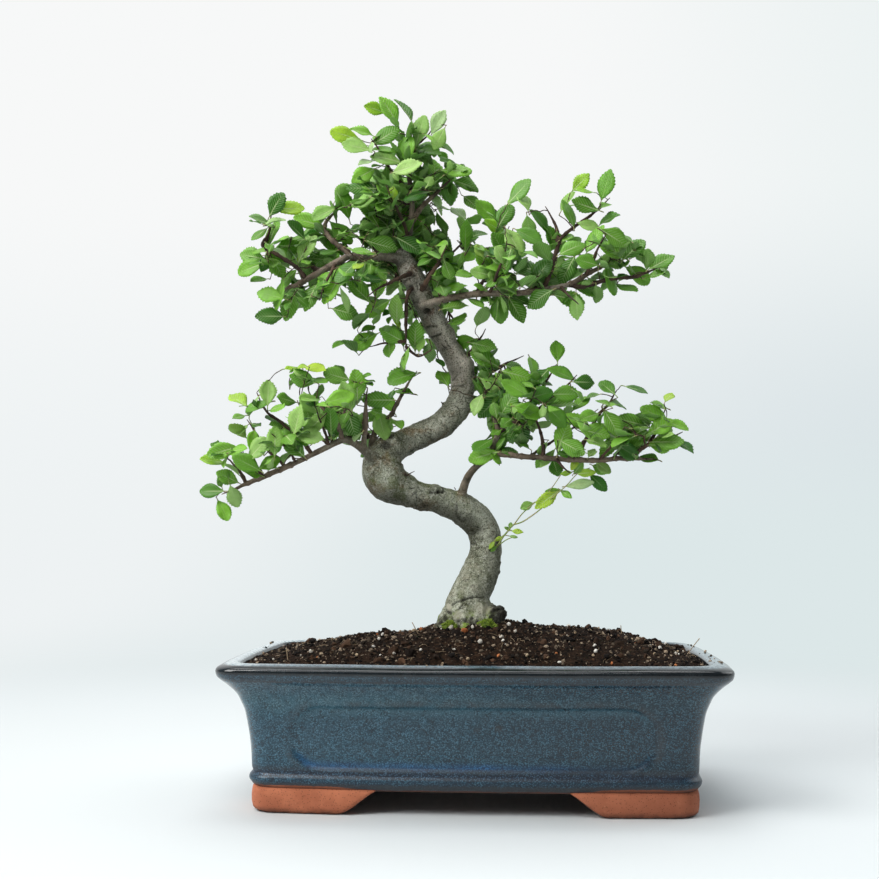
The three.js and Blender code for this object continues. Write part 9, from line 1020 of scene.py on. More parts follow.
    [(-89.4, -3.7, 381.9, 0.46), (-89.8, -8, 381.5, 0.46), (-89.7, -11, 380, 0.46), (-85.2, -13.2, 378.8, 0.34), (-83.6, -17.1, 377.4, 0.32), (-81.9, -21.2, 377.6, 0.32), (-80.6, -25.1, 375.9, 0.32), (-79.2, -29.9, 375.7, 0.32), (-79.3, -33.4, 374.5, 0.32), (-78.9, -37, 374.1, 0.32)],
    [(-89.7, -11, 380, 0.35), (-92.3, -13.3, 377.4, 0.32)],
    [(-92.5, -4.7, 378.9, 0.32), (-94.4, -6, 383.1, 0.32)],
    [(-94.2, -5.3, 377.4, 0.34), (-92.3, -5.5, 374.6, 0.34), (-92.6, -2.1, 370.6, 0.32)],
    [(-97.5, -7.5, 372.4, 0.32), (-101.5, -8.7, 372.9, 0.32)],
    [(-98.3, -8.2, 370.7, 0.32), (-97.6, -12.3, 371.4, 0.32)],
    [(-98.5, -10, 366.9, 0.55), (-100.6, -5.5, 365.6, 0.55), (-101.6, -3, 364.6, 0.51), (-100.2, 2.9, 361.9, 0.46), (-99.3, 7.1, 361.5, 0.46), (-97.9, 11.1, 359.8, 0.34), (-96.4, 14.3, 358.6, 0.34), (-92.5, 16.8, 354.8, 0.32)],
    [(-99.3, 7.1, 361.5, 0.35), (-100.2, 10.9, 365.3, 0.32)],
    [(-98.5, -10, 366.9, 0.32), (-98, -8.7, 366.1, 0.32)],
    [(-98, -11, 364.8, 0.32), (-98.7, -15.3, 365.7, 0.32)],
    [(-97.5, -12, 362.6, 0.32), (-93.3, -10.7, 365.2, 0.32), (-89.2, -10.1, 365.4, 0.32)],
    [(-97, -13, 360.5, 0.32), (-100.8, -15.3, 359, 0.32), (-105.6, -18, 356.1, 0.32)],
    [(-92.8, -15.5, 356.2, 0.34), (-89.9, -19.6, 358.2, 0.34), (-85.5, -21.1, 359.5, 0.32), (-82.3, -22.4, 360.4, 0.32), (-78.5, -22.8, 360.6, 0.32)],
    [(-91.4, -16.3, 354.8, 0.41), (-88.7, -12.9, 356.9, 0.41), (-85.9, -8.9, 358.3, 0.34), (-85.3, -6.4, 357.1, 0.32)],
    [(-88.7, -12.9, 356.9, 0.35), (-85.5, -12.9, 359.4, 0.32), (-82.3, -13.3, 360.8, 0.32)],
    [(-90, -17.2, 353.3, 0.32), (-92.5, -15.2, 349, 0.32)],
    [(-87, -19, 350.5, 0.32), (-87.9, -19, 348.5, 0.32)],
    [(-117.5, -27.5, 323.3, 0.32), (-115.6, -25.4, 321.9, 0.32)],
    [(-117.5, -27.5, 323.3, 0.32), (-118.6, -29.3, 323.3, 0.32)],
    [(-112.7, -28, 325.1, 0.41), (-111.6, -32.3, 321.5, 0.41), (-113.6, -34.8, 318.1, 0.34), (-115.5, -35.9, 314.9, 0.34), (-117.9, -37.1, 312.3, 0.32)],
    [(-115.5, -35.9, 314.9, 0.34), (-117.4, -34.6, 310.2, 0.32), (-118.8, -31.8, 305.9, 0.32), (-120.5, -28.2, 303, 0.32)],
    [(-100.7, -27.2, 331.8, 0.51), (-100.3, -25.6, 330.5, 0.51), (-99.5, -26.1, 327.4, 0.34), (-97.5, -27.1, 322.2, 0.32), (-96.3, -27.3, 316.9, 0.32), (-94.4, -27.5, 312.9, 0.32), (-93.6, -27.6, 308.5, 0.32)],
    [(-100.3, -25.6, 330.5, 0.38), (-99.7, -22.3, 326.1, 0.34), (-98.7, -19.5, 323.3, 0.34), (-99.2, -14.9, 323, 0.32), (-99.3, -10, 322.8, 0.32)],
    [(-87.3, -24.5, 340, 0.32), (-86.1, -26, 337.8, 0.32)],
    [(-74.9, -21, 343.8, 0.34), (-73.3, -22.3, 348.7, 0.34), (-71.5, -23.2, 353.5, 0.34), (-70.5, -21.9, 356.8, 0.32), (-69.1, -19.8, 360.2, 0.32)],
    [(-57.7, -15, 344.7, 0.32), (-59.2, -14.6, 341.2, 0.32)],
    [(-28, -2, 435.2, 0.32), (-24.8, -4.6, 435, 0.32), (-22.2, -7.4, 435.1, 0.32), (-18.4, -11.1, 433.7, 0.32)],
    [(-32.3, 1, 430.8, 0.34), (-28.9, 2, 428.6, 0.34), (-24.6, 3, 425.3, 0.32)],
    [(-28.9, 2, 428.6, 0.34), (-27.8, 5.1, 426.7, 0.32), (-27.5, 9.2, 424.1, 0.32)],
    [(-32.3, 1, 430.8, 0.32), (-33.3, -3.4, 431, 0.32), (-34.8, -7.6, 429.4, 0.32)],
    [(-32.3, 1, 430.8, 0.32), (-30.3, -2.7, 427.6, 0.32)],
    [(-37, 3.2, 427.6, 0.34), (-40.2, 0.7, 431.7, 0.34), (-41.1, -2.6, 434.6, 0.32), (-40.7, -6.2, 435.8, 0.32)],
    [(-42.1, 5.3, 423.3, 0.34), (-40.9, 7.8, 421.8, 0.34), (-38.7, 11.3, 419.7, 0.34), (-35.4, 14, 418.1, 0.32)],
    [(-42.1, 5.3, 423.3, 0.32), (-43.5, -0.1, 424.3, 0.32)],
    [(-33.7, 40.6, 392.9, 0.32), (-30.4, 38.7, 394.8, 0.32), (-27.3, 37.4, 395.9, 0.32), (-23.6, 35.2, 397, 0.32)],
    [(-33.7, 40.6, 392.9, 0.32), (-32.2, 36.8, 395, 0.32), (-29.2, 33.1, 395.6, 0.32)],
    [(-34.3, 38.3, 389.6, 0.32), (-38, 43.7, 388.5, 0.32)],
    [(-34.6, 37.1, 388, 0.32), (-34.4, 39.8, 386.5, 0.32), (-34.5, 42.8, 383.9, 0.32)],
    [(-34.9, 36, 386.3, 1.01), (-37.1, 33.8, 390.9, 1.01), (-38.8, 32.8, 395.4, 1.01), (-43.6, 30.1, 394.5, 0.96), (-41.6, 28, 393.6, 0.94), (-42.7, 27.7, 392.3, 0.93), (-47.2, 27.8, 391, 0.85), (-51.6, 28.8, 390.4, 0.85), (-56.3, 30.5, 391.3, 0.78), (-58.1, 34.4, 390.6, 0.71), (-61.7, 36.7, 389.6, 0.65), (-62.9, 40.3, 391.2, 0.55), (-62.5, 44.7, 392.9, 0.41), (-62.5, 49.2, 395.6, 0.34), (-63.3, 53.7, 397.3, 0.34), (-63.3, 56.9, 399.6, 0.34), (-62.6, 56.7, 404.7, 0.32), (-60.9, 56.6, 409.7, 0.32), (-59.5, 54.8, 413.4, 0.32)],
    [(-62.9, 40.3, 391.2, 0.45), (-65.5, 44.2, 394, 0.41), (-69.3, 46.9, 395.4, 0.41), (-71.7, 48.9, 397, 0.41), (-72.8, 48.9, 399.4, 0.34), (-75.9, 45.7, 401.3, 0.32)],
    [(-61.7, 36.7, 389.6, 0.45), (-64.4, 38.5, 387.8, 0.41), (-67.3, 40.1, 387.2, 0.41), (-70.7, 43.1, 386, 0.34), (-74, 45.5, 384.9, 0.34), (-76, 47, 384.1, 0.34), (-78.6, 48.3, 387.7, 0.32)],
    [(-58.1, 34.4, 390.6, 0.38), (-58.3, 38.6, 388.6, 0.34), (-59.7, 39.7, 385.1, 0.32), (-60.4, 39.3, 382.1, 0.32)],
    [(-56.3, 30.5, 391.3, 0.35), (-61.2, 28.6, 391.3, 0.32), (-64.7, 25.8, 391.4, 0.32)],
    [(-56.3, 30.5, 391.3, 0.35), (-58.2, 32, 394.7, 0.32), (-59, 33, 399.8, 0.32)],
    [(-51.6, 28.8, 390.4, 0.38), (-55.5, 29, 387.1, 0.34), (-58.1, 28.8, 384.1, 0.34), (-60.4, 28.5, 381, 0.34), (-63.6, 27.3, 380.6, 0.32)],
    [(-42.7, 27.7, 392.3, 0.45), (-43.9, 30.5, 388.6, 0.41), (-45.3, 32.1, 384.6, 0.34), (-45, 36.2, 383, 0.32), (-44.6, 40.3, 383, 0.32)],
    [(-38.8, 32.8, 395.4, 0.38), (-38.9, 31.2, 400.2, 0.34), (-37.3, 30.1, 405.1, 0.34), (-36.1, 26.1, 404.8, 0.32)],
    [(-36.9, 30, 380.8, 0.41), (-36.5, 33.1, 378.6, 0.41), (-37.1, 36.9, 375.1, 0.41), (-37, 43.5, 374.7, 0.34), (-34, 46.6, 374.8, 0.32), (-31.1, 48.5, 375.8, 0.32), (-27.8, 50.2, 376.1, 0.32)],
    [(-36.9, 30, 380.8, 0.51), (-33, 27.2, 381.9, 0.51), (-30.9, 24.9, 384.3, 0.46), (-28, 24.2, 386.2, 0.46), (-29.1, 22.2, 386, 0.41), (-26.7, 19.6, 385.7, 0.32)],
    [(-29.1, 22.2, 386, 0.35), (-32.4, 20.2, 389.5, 0.32)],
    [(-36.9, 30, 380.8, 0.32), (-36.5, 27, 384.1, 0.32)],
    [(-38.4, 25.5, 376.7, 0.32), (-38.9, 26.8, 375, 0.32)],
    [(-39.8, 20.9, 373, 0.32), (-36.8, 23.2, 371.1, 0.32)],
    [(-39.8, 20.9, 373, 0.32), (-38.2, 19.1, 376, 0.32)],
    [(-41.2, 16.2, 369.5, 0.41), (-37.5, 16.5, 369.8, 0.41), (-33.3, 15.9, 369.3, 0.41), (-32.3, 14.2, 366.4, 0.34), (-31.2, 11.4, 364.1, 0.32)],
    [(-32.3, 14.2, 366.4, 0.34), (-33, 16.9, 361.9, 0.32), (-33.3, 21.3, 358.5, 0.32)],
    [(-43.1, 10, 364.8, 0.58), (-48.7, 8.2, 365.1, 0.58), (-53.7, 6.4, 363.6, 0.58), (-54.1, 10.1, 360.9, 0.55), (-55.7, 7.1, 358.1, 0.51), (-54.5, 7, 355.6, 0.46), (-54.8, 5.5, 355.3, 0.41), (-52.4, 2.2, 356.4, 0.32)],
    [(-54.8, 5.5, 355.3, 0.35), (-56.2, 2, 357.5, 0.32), (-58.7, 0.2, 360.7, 0.32)],
    [(-43.1, 10, 364.8, 0.32), (-41.9, 12.2, 362.1, 0.32)],
    [(-43.1, 10, 364.8, 0.58), (-45.8, 10.7, 364, 0.58), (-48, 12.7, 364.8, 0.55), (-52.8, 11, 367.8, 0.51), (-54, 11.5, 373.6, 0.46), (-54.5, 13.3, 378.3, 0.46), (-56.4, 13.3, 378.3, 0.41), (-60.5, 12.5, 377.1, 0.34), (-64.7, 14.4, 373.8, 0.32), (-67.4, 16.7, 371.6, 0.32)],
    [(-48, 12.7, 364.8, 0.35), (-51.2, 15.3, 366.1, 0.32)],
    [(-44.1, 4.8, 361, 0.32), (-39.9, 6.3, 359.5, 0.32), (-35.4, 8.8, 358.1, 0.32)],
    [(-44.5, 3, 359.7, 0.32), (-45.7, 3.4, 360.5, 0.32)],
    [(-55, -28, 384.2, 0.32), (-50.9, -33, 385, 0.32)],
    [(-53.6, -26, 380.8, 0.32), (-57.2, -24.6, 380.2, 0.32)],
    [(-51.2, -22.4, 376.6, 0.65), (-52, -20.2, 377.9, 0.65), (-54.1, -17.5, 380.4, 0.65), (-56.8, -17.1, 383.2, 0.62), (-59.9, -18, 385.3, 0.62), (-64.6, -17.3, 385.7, 0.58), (-66.9, -16.7, 385.4, 0.58), (-67.3, -14.4, 382.4, 0.55), (-65.7, -11.8, 378.2, 0.55), (-64.8, -8.1, 373.5, 0.51), (-64.9, -5.5, 369.5, 0.34), (-64.3, -2.7, 366.8, 0.32)],
    [(-64.9, -5.5, 369.5, 0.34), (-64.2, -7.4, 366.7, 0.32), (-62.8, -10.3, 364.8, 0.32)],
    [(-64.8, -8.1, 373.5, 0.35), (-58.8, -7.2, 372.9, 0.32)],
    [(-64.8, -8.1, 373.5, 0.38), (-63.7, -4.2, 373.7, 0.34), (-62.2, -1.3, 376.2, 0.32)],
    [(-63.7, -4.2, 373.7, 0.34), (-66.3, -1.5, 375.7, 0.32), (-70.4, -0.9, 375.8, 0.32)],
    [(-50.4, -21.2, 375.2, 0.34), (-46.9, -22.1, 378.6, 0.34), (-44.3, -22, 381.7, 0.34), (-41.8, -22.8, 385, 0.34), (-36.5, -22.3, 386.7, 0.32), (-31.1, -22.3, 386.5, 0.32), (-26.2, -21.6, 385.7, 0.32)],
    [(-50.4, -21.2, 375.2, 0.32), (-53.5, -23.2, 372.8, 0.32)],
    [(-47.1, -13.6, 368.6, 0.46), (-51.5, -15, 365.4, 0.46), (-52.8, -15.2, 363.2, 0.34), (-53, -17.4, 357.6, 0.32)],
    [(-51.5, -15, 365.4, 0.35), (-53.8, -20.7, 365.2, 0.32)],
    [(-67.4, -10.8, 423.7, 0.32), (-70.2, -9.3, 421.3, 0.32), (-71.7, -8.3, 418.7, 0.32)],
    [(-67.4, -10.8, 423.7, 0.32), (-68, -14.6, 422.7, 0.32)],
    [(-67.4, -10.8, 423.7, 0.32), (-64.9, -10.1, 426.6, 0.32)],
    [(-67.4, -10.8, 423.7, 0.34), (-68.5, -8.6, 424.2, 0.34), (-70.7, -3.7, 422.4, 0.32)],
    [(-66.1, -10.5, 421.9, 0.32), (-69.5, -10.5, 423, 0.32), (-73.4, -10.3, 424.1, 0.32)],
    [(-60.1, -8.5, 412, 0.41), (-64.8, -10, 410.6, 0.41), (-67.6, -12.7, 411.8, 0.34), (-66.2, -16.1, 413.5, 0.32), (-65.3, -18.7, 414.2, 0.32)],
    [(-59, -8, 409.9, 0.32), (-64, -10.1, 406.1, 0.32)],
    [(-56.5, -6, 406.4, 0.34), (-55.1, -9.3, 405.2, 0.34), (-55.1, -13.2, 402.7, 0.32), (-54.7, -17, 400.7, 0.32), (-55.5, -19.5, 398.4, 0.32)],
    [(-48.3, 0, 396.5, 0.32), (-49.6, -2.5, 394.8, 0.32)],
    [(-48.3, 0, 396.5, 0.34), (-48.7, 1.5, 397.4, 0.34), (-50.3, 3.6, 398, 0.32)],
    [(-45.8, 2, 393.6, 0.46), (-44.1, -0.2, 393.1, 0.46), (-41.7, -2.8, 394.8, 0.41), (-38.8, -4, 397.1, 0.41), (-37.2, -0.8, 398.8, 0.34), (-32.9, 0.1, 402.1, 0.32), (-28.9, 1.1, 404.2, 0.32), (-25.1, 0.3, 406.6, 0.32)],
    [(-44.1, -0.2, 393.1, 0.35), (-43, -4.5, 391.6, 0.32)],
    [(-43.3, 4, 390.7, 0.32), (-42.8, 7.7, 389.7, 0.32), (-43.8, 12.7, 387.8, 0.32)],
    [(-12.2, 16, 408.9, 0.32), (-9.1, 13.5, 409, 0.32), (-5.7, 10.6, 409.1, 0.32)],
    [(-12.2, 16, 408.9, 0.32), (-11.3, 12, 413.9, 0.32)],
    [(-14, 15.7, 407.5, 0.34), (-14.3, 19.2, 405.8, 0.34), (-15.4, 22.8, 408.7, 0.32)],
    [(-15.8, 15.3, 406, 0.32), (-14.3, 16.5, 402.2, 0.32), (-11.6, 16.7, 398.7, 0.32), (-9.8, 17.7, 394.5, 0.32)],
    [(-15.8, 15.3, 406, 0.32), (-14.4, 13, 403.6, 0.32), (-12.6, 11.2, 401.1, 0.32), (-10.2, 9.4, 397.9, 0.32)],
    [(-15.8, 15.3, 406, 0.34), (-19.2, 17.4, 409, 0.34), (-22.8, 21.2, 412.2, 0.34), (-29, 21.8, 411.1, 0.32)],
    [(-15.8, 15.3, 406, 0.46), (-16.8, 11.9, 406.7, 0.46), (-16.7, 7.8, 407.6, 0.46), (-16.9, 7.3, 407.5, 0.41), (-17, 5.7, 404.3, 0.34), (-16.6, 4.1, 401.2, 0.34), (-17.8, -1, 400.4, 0.32), (-19.9, -6.1, 401.5, 0.32)],
    [(-25.1, 12.2, 396.8, 0.32), (-26.4, 16.5, 398, 0.32), (-28.4, 22.2, 398.5, 0.32)],
    [(-25.1, 12.2, 396.8, 0.32), (-21.5, 7.2, 395.9, 0.32)],
    [(-29.6, 10, 391.5, 0.32), (-33, 9.9, 394.3, 0.32), (-36.8, 10.2, 395.8, 0.32)],
    [(-36, 6, 383.9, 0.32), (-35.5, 5.7, 384.9, 0.32)],
    [(-41.1, 1.7, 374.7, 0.41), (-39.9, -1.5, 374.6, 0.41), (-38.6, -5.7, 373.4, 0.41), (-35, -7.5, 369.4, 0.34), (-31.9, -7.2, 366.8, 0.32), (-29.1, -5.8, 362.8, 0.32), (-26.5, -5.1, 360.8, 0.32)],
    [(-43.5, 5, 431.1, 0.41), (-47.2, 0.9, 432.2, 0.41), (-50.6, -3.1, 432.1, 0.41), (-50.6, -6, 434.7, 0.34), (-53.3, -6.1, 438.9, 0.32), (-56.1, -5.8, 441.7, 0.32), (-58.1, -4.3, 444.4, 0.32)],
    [(-43.8, 5.8, 424.1, 0.34), (-45.3, 5.4, 424.7, 0.34), (-45.6, 5.7, 425.8, 0.32)],
    [(-43.9, 6, 421.7, 0.41), (-44.7, 10.4, 422, 0.41), (-45, 14.9, 422.8, 0.41), (-46.5, 16.8, 425.6, 0.34), (-49.7, 17.9, 429.4, 0.34), (-50.7, 15.3, 435.5, 0.32)],
    [(-45, 14.9, 422.8, 0.35), (-45.9, 20.9, 422.6, 0.32)],
    [(-44, 6, 419.3, 0.32), (-41.7, 2.7, 419.9, 0.32), (-40.1, -1.5, 420.3, 0.32)],
    [(-44.4, 6, 414.5, 0.41), (-41.3, 1.4, 412.8, 0.41), (-42.9, -3.6, 409.3, 0.34), (-44.4, -7.5, 408.1, 0.32), (-46, -11.1, 407.6, 0.32)],
    [(-44.4, 6, 414.5, 0.32), (-48.7, 6.6, 415.4, 0.32)],
    [(-44.5, 5.8, 410, 0.34), (-47.1, 2.7, 410.5, 0.34), (-49.2, -0.2, 411.3, 0.34), (-51.3, 1.3, 410.1, 0.32)],
    [(-44.5, 5.8, 410, 0.32), (-40.4, 7.8, 409, 0.32)],
    [(-44.5, 5.6, 408, 0.55), (-44.9, 11, 407.4, 0.55), (-46.1, 14.9, 404.2, 0.46), (-47.6, 16.8, 400.3, 0.46), (-47.8, 20.7, 398.9, 0.34), (-48.7, 25.9, 400.5, 0.32), (-49.2, 30, 402.8, 0.32)],
    [(-47.6, 16.8, 400.3, 0.35), (-53.2, 19.1, 402.4, 0.32)],
    [(-44.9, 11, 407.4, 0.35), (-48, 15.1, 408.9, 0.32), (-50.6, 18.1, 410.5, 0.32)],
    [(-44.4, 5.4, 406, 0.32), (-45.5, -0.8, 407.2, 0.32)],
    [(-42.7, 3.2, 385.7, 0.76), (-46.1, 4.5, 385.2, 0.76), (-49.5, 1.8, 386.1, 0.73), (-52.9, -0.2, 387.5, 0.71), (-56.3, -3.6, 389.5, 0.68), (-59.9, -6.2, 391.1, 0.68), (-61.2, -3.3, 394.8, 0.62), (-65.4, 0.8, 392.3, 0.58), (-66.8, 1.3, 396.5, 0.46), (-64.7, 3.9, 396.5, 0.34), (-64.9, 8.1, 398.7, 0.32), (-66.3, 12.1, 401.7, 0.32), (-67.3, 15.1, 403.7, 0.32)],
    [(-66.8, 1.3, 396.5, 0.35), (-68, -2.1, 397.3, 0.32)],
    [(-65.4, 0.8, 392.3, 0.35), (-66.7, 5.2, 389.4, 0.32), (-67.3, 9.2, 386.1, 0.32)],
    [(-65.4, 0.8, 392.3, 0.35), (-65, 1.1, 389.5, 0.32)],
    [(-59.9, -6.2, 391.1, 0.35), (-58.9, -7.1, 391.9, 0.32)],
    [(-59.9, -6.2, 391.1, 0.35), (-62.3, -9.7, 391.5, 0.32)],
    [(-49.5, 1.8, 386.1, 0.35), (-50.1, -2.5, 386.1, 0.32), (-50.6, -5.2, 386.4, 0.32)],
    [(-46.1, 4.5, 385.2, 0.35), (-49.4, 5.4, 383, 0.32), (-53.3, 6.2, 380.9, 0.32)],
    [(-42.7, 3.2, 385.7, 0.32), (-39.8, 1.1, 386.1, 0.32)],
    [(-42.5, 3, 383.5, 0.41), (-44.8, 6.5, 382.9, 0.41), (-46.2, 11.9, 383, 0.41), (-46.7, 17.6, 383.6, 0.34), (-46.7, 21.2, 385.2, 0.32)],
    [(-46.7, 17.6, 383.6, 0.34), (-47.2, 21.1, 381.1, 0.32)],
    [(-42.6, 1.5, 377.2, 0.34), (-48.9, 3.1, 376.5, 0.34), (-51.2, 3.3, 375.1, 0.32)],
    [(-42.9, 0.5, 372.8, 0.34), (-44.4, -2, 374.5, 0.34), (-48.5, -4.8, 376, 0.32), (-52.4, -7.5, 377.1, 0.32)],
    [(-44.5, -2, 361.8, 0.32), (-43.1, -1.1, 362, 0.32)],
    [(-46.5, -4, 350.5, 0.41), (-44.8, 1, 348.8, 0.41), (-40.9, 2, 345.9, 0.34), (-38.8, 4.9, 345.9, 0.32)],
    [(-46.9, -4.7, 345.8, 0.32), (-49, 1.1, 344.8, 0.32)],
]

# Green stems of the young sprout low on the trunk: points x, y, z and radius.
SPROUT = [[(13.65, 0.8, 155.42, 0.62), (17.6, -0.76, 161.9, 0.59), (20.88, -2.53, 165.78, 0.56), (22.84, -3.59, 168.35, 0.53), (24.79, -4.65, 169.95, 0.5)], [(24.79, -4.65, 169.95, 0.42), (29.98, -7.24, 176.67, 0.4), (35.13, -9.8, 181.42, 0.37), (41.52, -13, 186.44, 0.35), (47.89, -14.78, 191.79, 0.33), (51.71, -15.84, 196.84, 0.3), (54.9, -16.73, 201.57, 0.28)], [(24.79, -4.65, 169.95, 0.48), (29.95, -7.24, 171.52, 0.46), (35.09, -9.8, 174.68, 0.44), (41.47, -13, 179.41, 0.41), (49.11, -15.13, 186.67, 0.39), (55.44, -16.91, 192, 0.37), (59.23, -17.98, 195.44, 0.35), (63.02, -19.04, 199.83, 0.32), (67.41, -20.29, 203.55, 0.3), (73.06, -21, 205.39, 0.28)], [(14.96, 0.65, 156.71, 0.42), (19.55, -1.82, 159.96, 0.34), (23.45, -3.94, 161.57, 0.26)]]

